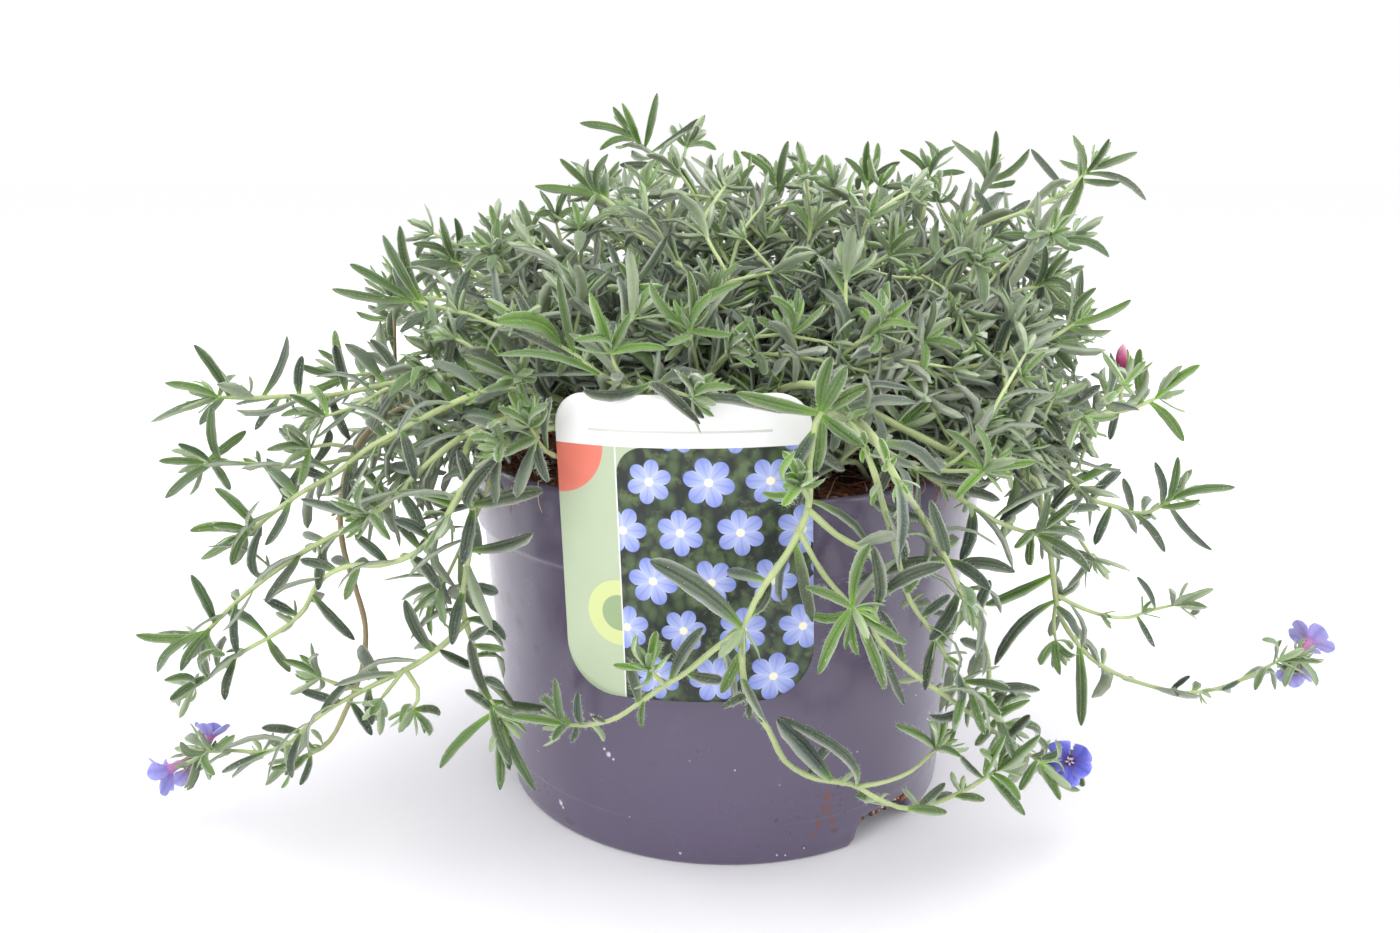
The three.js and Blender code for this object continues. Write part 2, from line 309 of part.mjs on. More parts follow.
    stems: [
      { r: 0.67, sides: 4, steps: 5, points: [[32, 8, 101.3], [36.4, 7.4, 111.7], [41.9, 6.7, 122], [49.3, 5.6, 130.8], [56.8, 5.4, 139.7], [63.8, 6.9, 148.8], [69.5, 10, 158.4], [74, 14.4, 168.2], [79.2, 18, 177.9]] },
      { on: 0, share: 0.7745, r: 0.5, sides: 3, steps: 2, points: [[65.9, 10.5, 165.2], [62.4, 10, 170.8]] },
    ],
    leaves: [
      [1, 0.9657, 64.6, -1.8, 175.2, 3.3, -0.78, 0.12, 0.61, 0.064],
      [1, 0.9535, 53.6, -1.5, 169.7, 3.3, 0.25, -0.25, 0.93, 0.082],
    ],
  },
  {
    name: 'shoot_front_star_1',
    stems: [
      { r: 0.67, sides: 4, steps: 3, points: [[-2, -42, 101.3], [-3.7, -45.9, 112.4], [-6.5, -51.7, 122.7], [-8.3, -58.7, 132.6], [-10.4, -64, 143.3]] },
      { on: 0, share: 0.6232, r: 0.5, sides: 3, steps: 2, points: [[-4.6, -60.8, 132.6], [-1, -66, 137.4]] },
      { on: 0, share: 0.2871, r: 0.5, sides: 3, steps: 2, points: [[-5.7, -50.2, 117], [-8.4, -56.5, 115.2], [-10.7, -61.8, 113.1]] },
      { on: 0, share: 0.4545, r: 0.5, sides: 3, steps: 2, points: [[-8.2, -53.8, 124.8], [-12.8, -57.5, 127.1], [-16.6, -60.9, 128.1]] },
      { on: 0, share: 0.833, r: 0.5, sides: 3, steps: 2, points: [[-10.4, -60.7, 138.7], [-13.9, -56.7, 140], [-16.8, -53.8, 140.5]] },
    ],
    leaves: [
      [0, 0.985, -22, -58.4, 148.8, 3.3, -0.02, -0.76, 0.65, 0.073],
      [0, 0.9779, -10.3, -69.2, 156.6, 3.3, -0.06, -0.93, -0.37, 0.098],
      [0, 0.985, -19.1, -69.5, 154.1, 3.9, 0.66, -0.74, 0.13, 0.031],
      [0, 0.9659, -15.6, -75.1, 140.4, 3.3, 0.29, -0.24, 0.93, 0.066],
      [0, 0.9779, -0.7, -72.8, 142.4, 3.3, -0.46, -0.47, 0.76, 0.052],
      [1, 0.985, 2.5, -78.1, 143.1, 3.3, -0.62, 0.18, 0.77, 0.034],
    ],
  },
  {
    name: 'shoot_front_star_2',
    stems: [
      { r: 0.67, sides: 4, steps: 3, points: [[8, -40, 101.3], [11.7, -44.6, 111.4], [16.5, -51.1, 120.2], [16.7, -57, 130.5], [14.5, -60, 141.8]] },
      { on: 0, share: 0.8108, r: 0.5, sides: 3, steps: 2, points: [[10.9, -59.6, 134.3], [5.7, -60, 136.5]] },
    ],
    leaves: [
      [0, 0.9657, 5.6, -68.9, 145.8, 3.3, 0.71, -0.33, 0.62, 0.033],
      [0, 0.9536, 16.3, -53.5, 151.2, 3.3, -0.13, -0.87, 0.47, 0.075],
      [0, 0.985, 22.1, -48.1, 137.7, 3.3, 0.56, -0.1, 0.82, 0.071],
      [1, 0.985, 0.4, -71.3, 143.4, 3.3, 0.61, 0.18, 0.77, 0.094],
    ],
  },
  {
    name: 'shoot_front_star_3',
    stems: [
      { r: 0.67, sides: 4, steps: 3, points: [[18, -36, 101.3], [19.6, -41.8, 110.2], [21.9, -48.5, 116.7], [24, -53.1, 124.8], [26.5, -58.9, 135], [34.8, -62, 142.1]] },
      { on: 0, share: 0.8802, r: 0.5, sides: 3, steps: 2, points: [[38.8, -57, 136.2], [47.8, -53.7, 138.5]] },
      { on: 1, share: 0.5388, r: 0.5, sides: 3, steps: 2, points: [[42.4, -54.4, 137.6], [40.4, -50.6, 141.5], [39.4, -47.4, 143.6]] },
      { on: 0, share: 0.4099, r: 0.5, sides: 3, steps: 2, points: [[22.8, -51.5, 120.8], [22.9, -53.4, 124.4], [23.1, -55.2, 126.7]] },
    ],
    leaves: [
      [0, 0.963, 41.7, -66.7, 149.7, 3.3, -0.66, -0.73, 0.2, 0.052],
      [0, 0.9761, 36.7, -53.5, 151.2, 3.3, 0.06, -0.78, 0.62, 0.038],
      [1, 0.985, 40.6, -65.1, 145.3, 3.3, 0.83, -0.2, 0.52, 0.037],
      [1, 0.985, 47.9, -62.7, 149.3, 3.3, 0.9, 0.34, 0.26, 0.063],
      [1, 0.9494, 45.2, -65.1, 132.5, 3.3, 0.13, -0.47, 0.87, 0.057],
    ],
  },
  {
    name: 'shoot_centre_right',
    stems: [
      { r: 0.67, sides: 4, steps: 5, points: [[14, -14, 101.3], [13.7, -16.3, 112], [13.5, -19.4, 122.8], [13.9, -22.8, 133.4], [18.4, -24, 143.6], [25.9, -22.4, 151.6], [36.5, -20.1, 152.8], [45.8, -17, 157.8]] },
      { on: 0, share: 0.4276, r: 0.5, sides: 3, steps: 2, points: [[13.9, -23.5, 136.4], [12.4, -24.2, 139.8], [11.2, -24.8, 142.1]] },
      { on: 0, share: 0.3332, r: 0.5, sides: 3, steps: 2, points: [[13.5, -22.4, 128.2], [13.7, -26.5, 127.4], [13.8, -29.9, 126.4]] },
    ],
    leaves: [
      [0, 0.985, 51.5, -7.4, 148.5, 3.3, 0.9, -0.35, 0.26, 0.071],
      [0, 0.9538, 54.6, -23.3, 158.4, 3.3, -0.42, -0.63, 0.65, 0.057],
      [0, 0.985, 37.4, -25.2, 166.4, 3.3, 0.82, -0.5, 0.26, 0.042],
      [0, 0.9779, 46.5, -10, 168, 3.3, 0.06, -0.83, 0.55, 0.041],
      [0, 0.9659, 50.8, -25.1, 164.3, 3.3, -0.81, -0.52, 0.26, 0.071],
    ],
  },
  {
    name: 'shoot_right_upper',
    stems: [
      { r: 0.68, sides: 4, steps: 7, points: [[28, -2, 101.3], [30.4, -2.7, 111.7], [33.9, -3.7, 122.1], [38.6, -4.7, 132], [44.7, -4.5, 141.1], [51.6, -3.3, 149.6], [59.4, -0.8, 156.9], [69.1, 1.2, 161.6], [79.2, 3.3, 165.2], [89.4, 5.7, 168.6], [99, 7.9, 173.4], [107.1, 10, 180.5]] },
    ],
    leaves: [
      [0, 0.9132, 87.3, 5, 185.1, 3.7, 0.48, -0.82, 0.3, 0.06],
      [0, 0.9779, 108.2, 1.6, 187.8, 3.3, -0.88, -0.45, -0.11, 0.079],
      [0, 0.9658, 98.4, 3.1, 188.9, 3.3, 0.61, -0.78, -0.11, 0.048],
    ],
  },
  {
    name: 'shoot_right_fan',
    stems: [
      { r: 0.67, sides: 4, steps: 5, points: [[33, -12, 101.3], [34.9, -14.9, 111.4], [37.5, -18.5, 121.3], [41, -23.3, 130.4], [47.9, -26, 138.3], [57.5, -24.9, 142.9], [67.7, -21.5, 144.8], [78.1, -18.9, 146.8], [88.4, -16, 148.7]] },
      { on: 0, share: 0.7239, r: 0.5, sides: 3, steps: 2, points: [[72.8, -18.1, 150.4], [80.2, -14.1, 156], [88.5, -10, 159.8]] },
      { on: 0, share: 0.5617, r: 0.5, sides: 3, steps: 2, points: [[57.2, -25.5, 144.7], [59.4, -25.7, 152.1], [62, -25.7, 156.6]] },
      { on: 0, share: 0.4358, r: 0.5, sides: 3, steps: 2, points: [[45.4, -26.6, 135.7], [45.1, -30.5, 134], [45.1, -33.7, 132.2]] },
      { on: 0, share: 0.2272, r: 0.5, sides: 3, steps: 2, points: [[38, -20.4, 121.4], [38.5, -25.4, 118], [39.2, -29.5, 114.8]] },
    ],
    leaves: [
      [0, 0.954, 84.6, -24.1, 159.8, 3.3, 0.04, -0.86, -0.51, 0.083],
      [0, 0.966, 94.7, -23.5, 146.2, 3.3, -0.29, -0.61, 0.74, 0.064],
      [0, 0.978, 99.8, -11.4, 153.3, 3.3, 0.06, -0.76, 0.65, 0.094],
      [0, 0.985, 94.3, -6.3, 139, 3.3, 0.88, -0.44, 0.17, 0.032],
      [1, 0.985, 82.2, -21, 167.5, 3.3, 0.88, -0.18, 0.44, 0.044],
      [1, 0.9782, 98.5, 0.9, 162, 3.3, 0.32, -0.48, 0.82, 0.097],
    ],
  },
  {
    name: 'shoot_right_level',
    stems: [
      { r: 0.67, sides: 4, steps: 6, points: [[22, -30, 101.3], [23, -35.7, 111], [24.7, -43.8, 119], [29.9, -50.9, 125.9], [40.4, -50, 128.9], [51.7, -47.7, 129.4], [62.5, -44.1, 130.4], [73.3, -40.4, 132.4], [83.6, -36.9, 136.3], [93.1, -33, 141.4]] },
      { on: 0, share: 0.4401, r: 0.5, sides: 3, steps: 2, points: [[47.9, -45.4, 131.1], [55.1, -40, 131.5], [62.4, -34.6, 131.3], [70.2, -30, 131.9]] },
      { on: 1, share: 0.5404, r: 0.5, sides: 3, steps: 2, points: [[58.2, -37.8, 133], [57, -39.3, 139.2], [56.5, -40.1, 143.1]] },
      { on: 0, share: 0.7199, r: 0.5, sides: 3, steps: 2, points: [[70.3, -41.6, 132.7], [71.1, -41.9, 136.9], [72.2, -42, 139.6]] },
      { on: 0, share: 0.3174, r: 0.5, sides: 3, steps: 2, points: [[31.1, -51.7, 126.6], [33.8, -53.3, 128.2], [36.2, -54.8, 128.9]] },
      { on: 0, share: 0.1848, r: 0.5, sides: 3, steps: 2, points: [[24.9, -42.9, 118.6], [27.5, -43.8, 121], [29.7, -44.9, 122.5]] },
    ],
    leaves: [
      [0, 0.985, 89.6, -23.9, 147.9, 3.3, -0.09, -0.6, 0.79, 0.05],
      [0, 0.9539, 98, -41.7, 139.4, 3.3, -0.41, -0.49, 0.77, 0.078],
      [1, 0.9539, 62.7, -42.4, 139.5, 3.3, 0.86, -0.12, 0.5, 0.049],
      [1, 0.9659, 68.9, -42.9, 141.6, 3.3, 0.92, 0.23, 0.32, 0.039],
      [1, 0.985, 75, -40, 137.9, 3.3, -0.81, -0.08, 0.58, 0.081],
      [1, 0.978, 78.3, -37.8, 130.5, 3.3, -0.32, -0.52, 0.79, 0.047],
    ],
  },
  {
    name: 'shoot_right_bud',
    stems: [
      { r: 0.68, sides: 4, steps: 7, points: [[34, -26, 101.3], [35.9, -31.9, 110.7], [38.6, -40.3, 118], [44.1, -48.5, 123.5], [55, -48.8, 125], [65.8, -45, 124.3], [76.6, -41.4, 122.7], [86.9, -38, 118.8], [97.4, -34.3, 116.2], [108.1, -30.1, 116], [118.5, -26, 118.9]] },
      { on: 0, share: 0.8788, r: 0.5, sides: 3, steps: 2, points: [[106.1, -31, 120.4], [106.2, -31, 125.1]] },
      { on: 0, share: 0.2159, r: 0.5, sides: 3, steps: 2, points: [[39.8, -44.6, 119.1], [38.1, -46.9, 114.6], [37, -49.1, 110.3]] },
    ],
    leaves: [
      [0, 0.9492, 110.3, -30.1, 132.8, 3.7, 0.12, -0.99, -0.1, 0.06],
      [0, 0.985, 121.8, -25.4, 123.5, 2.6, -0.39, -0.83, 0.4, 0.06],
      [0, 0.9848, 127.1, -29.6, 128.4, 3.9, -0.59, -0.7, 0.4, 0.04],
      [0, 0.9696, 124.3, -31.2, 107.7, 4.2, 0.17, -0.86, 0.48, -0.02],
    ],
  },
  {
    name: 'shoot_right_drop',
    stems: [
      { r: 0.67, sides: 4, steps: 7, points: [[38, -24, 101.3], [42.8, -29.1, 109.5], [49.8, -36.1, 114], [58.5, -41.9, 117], [68.8, -44.1, 119.8], [79, -41.8, 119.3], [85.1, -40.1, 110.6], [90.5, -38.2, 101.3], [97.4, -35.5, 93.3], [107, -32.4, 89.4], [116.4, -29.1, 86.5], [126.2, -26, 90.3]] },
      { on: 0, share: 0.2887, r: 0.5, sides: 3, steps: 2, points: [[67, -44.3, 116.6], [72.3, -43.7, 108.5], [77.6, -43.7, 100.3]] },
      { on: 0, share: 0.4656, r: 0.5, sides: 3, steps: 2, points: [[83.9, -43, 116.2], [85, -51.8, 119.5], [86.5, -58.4, 120]] },
      { on: 0, share: 0.3508, r: 0.5, sides: 3, steps: 2, points: [[71, -45.7, 121.6], [71.1, -50.9, 126.9], [72.1, -55.1, 129.9]] },
      { on: 1, share: 0.8178, r: 0.5, sides: 3, steps: 2, points: [[81.3, -44.5, 95.6], [88.8, -47.3, 89.4], [95.7, -49.6, 80.3]] },
    ],
    leaves: [
      [0, 0.985, 138.7, -33.5, 95.3, 3.9, -0.54, -0.5, 0.68, 0.073],
      [0, 0.957, 117.4, -30.4, 101.6, 3.5, 0.36, -0.93, -0.09, 0.06],
      [0, 0.977, 122.8, -32, 103.4, 3.3, -0.09, -0.93, -0.35, 0.081],
      [0, 0.9762, 136.3, -29.8, 75.9, 3.3, 0.29, -0.84, 0.46, -0.06],
      [0, 0.9517, 128.8, -35, 92.1, 3.3, -0.66, -0.29, 0.69, 0.034],
    ],
  },
  {
    name: 'shoot_right_long',
    stems: [
      { r: 0.7, sides: 4, steps: 13, points: [[30, -38, 101.3], [29.4, -39.5, 109.5], [27.1, -49.2, 118], [24.9, -58.4, 124.5], [30.8, -63.9, 124.3], [39.9, -64.7, 119.4], [49.3, -64.5, 114.7], [58.8, -61.2, 109.6], [68.8, -57.5, 107.2], [77.7, -53.9, 102.6], [81, -50.3, 92.8], [84.6, -47.9, 82.8], [87.2, -45.5, 72.5], [90.2, -43, 62.4], [96.1, -40.8, 53.4], [103.4, -38.3, 45.8], [112.3, -35.6, 40.1], [122, -33, 35.8], [132.3, -30.9, 32.8], [142.9, -28.9, 33], [153.2, -26.4, 35.8], [163, -24, 39.9]] },
      { on: 0, share: 0.5884, r: 0.5, sides: 3, steps: 3, points: [[95.8, -41.4, 63.7], [103.6, -38.9, 60.1], [111.9, -36, 58.1], [120, -32.4, 58.9], [128.6, -30, 59.8]] },
      { on: 0, share: 0.5956, r: 0.5, sides: 3, steps: 2, points: [[88.3, -44.9, 60.7], [89.1, -46, 55.1]] },
      { on: 0, share: 0.2846, r: 0.5, sides: 3, steps: 2, points: [[53.5, -63.9, 113.7], [55.9, -65.2, 117.3], [58.2, -66, 119.1]] },
      { on: 0, share: 0.3343, r: 0.5, sides: 3, steps: 2, points: [[63.3, -59.6, 108.9], [66.1, -58.5, 110.8], [68.7, -57.5, 111.4]] },
    ],
    leaves: [
      [1, 0.985, 131.2, -40.8, 63.2, 3.3, -0.46, 0.15, 0.88, 0.07],
      [1, 0.9658, 137.7, -18.1, 51.6, 3.3, 0.7, -0.15, 0.7, 0.076],
      [2, 0.9782, 90.4, -57.6, 56.5, 3.3, -0.55, 0.02, 0.84, 0.099],
      [2, 0.985, 81.7, -56.9, 53.4, 3.3, 0.25, -0.32, 0.91, 0.07],
      [2, 0.9663, 88, -54.6, 49.4, 3.3, -0.19, -0.55, 0.82, 0.091],
    ],
  },
  {
    name: 'shoot_right_front_1',
    stems: [
      { r: 0.67, sides: 4, steps: 7, points: [[26, -44, 101.3], [26.4, -40.1, 107.9], [24.7, -50.9, 115.9], [22.5, -67.4, 123], [27.6, -75.8, 121.9], [36.3, -72, 114.7], [45, -70.6, 109.7], [53.3, -67.3, 103.6], [61.4, -63.9, 97.5], [69.8, -59.6, 92.4], [79.3, -56, 88.6]] },
      { on: 0, share: 0.6144, r: 0.5, sides: 3, steps: 2, points: [[51.3, -74.3, 110.6], [59.1, -74.9, 111]] },
    ],
    leaves: [
      [0, 0.9793, 84.4, -62.8, 98.9, 3.3, -0.76, -0.62, 0.18, 0.032],
      [0, 0.9793, 73.7, -67.4, 84.8, 3.3, 0.11, -0.42, 0.9, 0.079],
      [0, 0.985, 90.1, -63.5, 81.6, 3.9, -0.01, -0.73, 0.68, 0.077],
      [1, 0.957, 69.1, -80.1, 114.3, 3.3, -0.49, -0.62, 0.61, 0.053],
      [1, 0.9682, 67.8, -63.9, 113.1, 3.3, 0.37, -0.47, 0.8, 0.039],
      [1, 0.985, 68.8, -64.3, 103.2, 3.3, 0.79, -0.41, 0.45, 0.096],
    ],
  },
  {
    name: 'shoot_right_front_2',
    stems: [
      { r: 0.7, sides: 4, steps: 10, points: [[20, -46, 101.3], [20.9, -55.8, 111.6], [23.3, -60, 118.5], [26.4, -66.5, 123], [30.3, -85.2, 122.3], [33.5, -103.5, 116.3], [43.1, -80, 102.3], [49.2, -79, 92.7], [54.2, -78, 82.6], [59.4, -76.7, 72.6], [63.2, -74.5, 62.2], [64.7, -72.5, 51.3], [70, -70, 42.3]] },
    ],
    leaves: [
      [0, 0.985, 81.8, -61.1, 35.3, 3.3, 0.7, -0.49, 0.52, 0.095],
    ],
  },
  {
    name: 'shoot_right_front_3',
    stems: [
      { r: 0.65, sides: 4, steps: 8, points: [[15, -46, 101.3], [16.8, -51.9, 110.3], [18.9, -62.4, 118.5], [20.1, -69.8, 124.1], [25.9, -84.8, 124.1], [30, -91.4, 116.1], [33.9, -88.7, 104.5], [37.7, -85.2, 93.1], [41.1, -83.8, 82.3], [47.5, -82.2, 73.1], [53, -80.2, 63.3], [59.8, -77, 54.6]] },
    ],
    leaves: [
      [0, 0.956, 65.7, -85.5, 60, 3.3, -0.46, -0.51, 0.72, 0.03],
      [0, 0.9789, 61.2, -83.2, 47.1, 3.3, 0.03, -0.87, 0.5, 0.066],
      [0, 0.9675, 53, -86.3, 51.4, 3.3, 0.02, -0.63, 0.78, 0.083],
    ],
  },
  {
    name: 'shoot_front_main',
    stems: [
      { r: 0.83, sides: 4, steps: 7, points: [[6, -44, 101.3], [6.4, -49, 110.4], [7.8, -55.3, 118.9], [10.1, -62.6, 126.4], [16.2, -69.8, 130.4], [24.7, -78.5, 129.7], [18.8, -84.6, 125.8], [16.6, -87.8, 116.1], [16.6, -88, 105.5], [12.2, -89.8, 96], [6.3, -91, 87.3], [2, -91, 77.6]] },
      { on: 0, share: 0.7107, r: 0.5, sides: 3, steps: 2, points: [[15.6, -89.8, 109.8], [14.7, -92, 111.9]] },
      { on: 0, share: 1, r: 0.59, sides: 3, steps: 4, points: [[-4.4, -89.9, 72.3], [-10.2, -88.2, 66.3], [-16.5, -86, 61.1], [-22.4, -83.6, 55.5], [-28.2, -80.5, 50.1], [-34.8, -76.6, 46.4], [-42.2, -73, 44.4]] },
      { on: 2, share: 0.4129, r: 0.5, sides: 3, steps: 2, points: [[-17.9, -87.9, 64.7], [-19.6, -90, 67.7]] },
      { on: 0, share: 1, r: 0.61, sides: 3, steps: 7, points: [[2.1, -91, 68.5], [3.7, -89.9, 59.7], [8.5, -90, 52.1], [12.5, -90, 43.9], [19.8, -89.5, 39.1], [28.5, -88.1, 36.8], [35.8, -86.6, 31.7], [43.6, -84.3, 27.8], [52.1, -81.4, 28.3], [60.2, -77.8, 30.1], [67.9, -74, 33]] },
      { on: 4, share: 0.5589, r: 0.5, sides: 3, steps: 2, points: [[37.1, -86.4, 36.4], [44.1, -84.4, 38.5], [49.8, -82, 43]] },
      { on: 0, share: 0.7684, r: 0.61, sides: 3, steps: 2, points: [[19.8, -91.4, 91.6], [26.9, -95, 84.1]] },
      { on: 0, share: 0.7279, r: 0.58, sides: 3, steps: 7, points: [[23.4, -89.1, 99.4], [31.3, -90.9, 94.8], [32.6, -90.8, 86.1], [32, -88.9, 77.3], [37, -87, 69.7], [43.3, -84.4, 63.3], [50.2, -81.9, 57.6], [56.7, -78.5, 51.7], [62.9, -74.8, 45.9], [69.2, -71.3, 39.9], [75.7, -67.4, 34.5], [82, -64, 28.5]] },
    ],
    leaves: [
      [1, 0.985, 12.1, -102.9, 122.2, 3.3, -0.98, 0.07, -0.18, 0.086],
      [1, 0.9544, 16, -106.9, 117.7, 3.3, -0.47, 0.3, 0.83, 0.048],
      [4, 0.985, 59.4, -85.9, 44.6, 3.3, 0.81, 0.07, 0.58, 0.054],
      [4, 0.9779, 70.9, -83, 29.4, 3.3, -0.08, -0.37, 0.92, 0.094],
      [5, 0.9657, 57.1, -71.2, 42.7, 3.3, 0.28, -0.21, 0.94, 0.031],
      [7, 0.9779, 73.4, -74.5, 27.1, 3.3, 0.16, -0.39, 0.91, 0.068],
    ],
  },
  {
    name: 'shoot_rim_left',
    stems: [
      { r: 0.58, sides: 4, steps: 3, points: [[-34, -50, 101.3], [-40.5, -60.5, 109.5], [-45, -67.6, 114.2], [-47.8, -71.2, 121]] },
      { on: 0, share: 0.8621, r: 0.5, sides: 3, steps: 2, points: [[-48.4, -73.7, 116.3], [-54, -73.6, 116.1]] },
    ],
    leaves: [
      [0, 0.985, -41.6, -58.2, 119.9, 3.3, 0.31, -0.07, 0.95, 0.034],
      [0, 0.9742, -52, -61.1, 126.4, 3.3, -0.13, -0.56, 0.82, 0.085],
      [1, 0.9648, -52.6, -86.6, 115.9, 3.3, -0.25, -0.04, 0.97, 0.031],
      [1, 0.9521, -53.8, -87.9, 124, 3.3, -0.45, 0.44, 0.78, 0.063],
    ],
  },
  {
    name: 'shoot_rim_right',
    stems: [
      { r: 0.58, sides: 4, steps: 3, points: [[36, -46, 101.3], [32.1, -53.6, 107.4], [26.8, -62.7, 110], [32.8, -65.4, 115.9], [42.6, -60.6, 118.6]] },
      { on: 0, share: 0.7269, r: 0.5, sides: 3, steps: 2, points: [[29.9, -65.1, 119.1], [28.4, -64.9, 122.7]] },
    ],
    leaves: [
      [0, 0.9755, 43.7, -52.2, 127, 3.3, 0.07, -0.71, 0.7, 0.059],
      [0, 0.985, 34.6, -70.1, 127.9, 3.3, 0.87, -0.33, 0.37, 0.052],
      [0, 0.985, 43.8, -48.7, 109.5, 3.3, 0.76, 0.32, 0.56, 0.096],
      [0, 0.9619, 48.2, -61.3, 125, 3.3, -0.38, -0.83, 0.4, 0.066],
      [1, 0.9699, 30.9, -78.5, 130.2, 3.3, -0.71, 0.25, 0.66, 0.064],
      [1, 0.9805, 26.7, -75.4, 132.9, 3.3, -0.39, 0.68, 0.62, 0.049],
    ],
  },
  {
    name: 'shoot_back_1',
    stems: [
      { r: 0.65, sides: 4, steps: 6, points: [[-34, 30, 101.3], [-36.7, 31.7, 111.6], [-43.1, 36.1, 119.5], [-50.3, 41, 126.3], [-58.4, 46.4, 131.8], [-67, 52.1, 135.9], [-76.2, 57.9, 138.2], [-85.8, 63.5, 138.9], [-95.4, 69, 137.9], [-104.7, 74.3, 135.1]] },
      { on: 0, share: 0.3981, r: 0.5, sides: 3, steps: 3, points: [[-61.9, 46.9, 133.9], [-69.3, 46.9, 138.4], [-76.5, 43.9, 142.6], [-82.6, 39.1, 146.4], [-88, 33.5, 149.8]] },
      { on: 0, share: 0.5989, r: 0.5, sides: 3, steps: 3, points: [[-76.7, 60.2, 139], [-80.6, 67.5, 140.7], [-81.9, 75.9, 142.1], [-81.2, 84.4, 143.1], [-79.5, 92.8, 144]] },
      { on: 0, share: 0.3124, r: 0.5, sides: 3, steps: 2, points: [[-56.6, 45.7, 126.9], [-64.1, 52.2, 117.9], [-71.2, 58.1, 108.8]] },
      { on: 3, share: 0.7614, r: 0.5, sides: 3, steps: 2, points: [[-67.7, 57.8, 112.4], [-64.2, 64.3, 114.5], [-61.9, 69.8, 114.1]] },
      { on: 3, share: 0.5771, r: 0.5, sides: 3, steps: 2, points: [[-67.2, 53, 117.3], [-74.1, 52.5, 121.4], [-80.1, 52.6, 122.4]] },
    ],
    leaves: [
    ],
  },
  {
    name: 'shoot_back_2',
    stems: [
      { r: 0.65, sides: 4, steps: 8, points: [[-22, 40, 101.3], [-23.1, 42.1, 112], [-26.7, 49.9, 118.9], [-31.1, 59.4, 122.9], [-35.7, 69.4, 125.4], [-40.4, 79.6, 125.9], [-45.5, 89.6, 124.4], [-51, 98.8, 120.8], [-56.2, 107.1, 115.3], [-60.9, 114.4, 108.1], [-65, 120.2, 99.4], [-68, 124.5, 89.4], [-70, 127.2, 78.6]] },
      { on: 0, share: 0.3477, r: 0.5, sides: 3, steps: 3, points: [[-38.7, 79.7, 127.6], [-38.1, 87.5, 131], [-34.9, 94.1, 135.6], [-30.1, 99.4, 140.6], [-24.8, 104, 145.7]] },
      { on: 0, share: 0.4983, r: 0.5, sides: 3, steps: 3, points: [[-50.9, 95.7, 122.9], [-57.9, 99.7, 122.3], [-66, 101.1, 122.5], [-74.2, 100.7, 123.3], [-82.2, 99.4, 124.4]] },
    ],
    leaves: [
    ],
  },
  {
    name: 'shoot_back_3',
    stems: [
      { r: 0.65, sides: 4, steps: 6, points: [[-8, 44, 101.3], [-8.6, 47, 111.4], [-10.5, 54.5, 119.1], [-12.7, 62.8, 125.8], [-14.9, 71.9, 131.2], [-17, 81.9, 135.2], [-18.8, 92.4, 137.5], [-20, 103.2, 138.2], [-21, 114, 137.2], [-22, 124.5, 134.4]] },
      { on: 0, share: 0.3978, r: 0.5, sides: 3, steps: 3, points: [[-16.9, 75, 134.1], [-21.2, 80.5, 139.4], [-27, 84, 145.1], [-33.5, 85.8, 150.7], [-40.4, 86.6, 156.2]] },
      { on: 0, share: 0.5989, r: 0.5, sides: 3, steps: 3, points: [[-16.9, 95.7, 138], [-11.4, 103.7, 138.3], [-3.4, 109.4, 137.5], [5.4, 113.6, 136.3]] },
      { on: 0, share: 0.276, r: 0.5, sides: 3, steps: 2, points: [[-14, 66.3, 123.8], [-17.2, 73.6, 113.1], [-20.1, 80.6, 103]] },
      { on: 3, share: 0.8784, r: 0.5, sides: 3, steps: 2, points: [[-24.2, 81.7, 101.6], [-36.6, 80.5, 105.5], [-46.6, 80.3, 104.9]] },
    ],
    leaves: [
    ],
  },
  {
    name: 'shoot_back_4',
    stems: [
      { r: 0.65, sides: 4, steps: 8, points: [[6, 46, 101.3], [6.2, 48.1, 111.7], [7.5, 55.7, 119.1], [9.5, 65.6, 123.4], [11.7, 75.9, 126.2], [13.9, 86.6, 127.2], [15.9, 97.3, 126.3], [17.5, 107.8, 123.4], [18.5, 117.6, 118.6], [19.1, 126.4, 112.2], [19.4, 133.9, 104.2], [19.5, 139.7, 94.9], [19.4, 143.6, 84.7], [19.5, 145.7, 73.9]] },
      { on: 0, share: 0.3478, r: 0.5, sides: 3, steps: 3, points: [[12.7, 90.5, 128.7], [8.9, 97.7, 131.9], [2.6, 102.6, 135.8], [-4.7, 105.5, 139.8], [-12.3, 107.8, 143.9]] },
      { on: 0, share: 0.4982, r: 0.5, sides: 3, steps: 3, points: [[20.2, 111.4, 123.2], [27, 118.2, 122.8], [35.6, 122.6, 123.6], [44.8, 125.3, 125.1]] },
    ],
    leaves: [
    ],
  },
  {
    name: 'shoot_back_5',
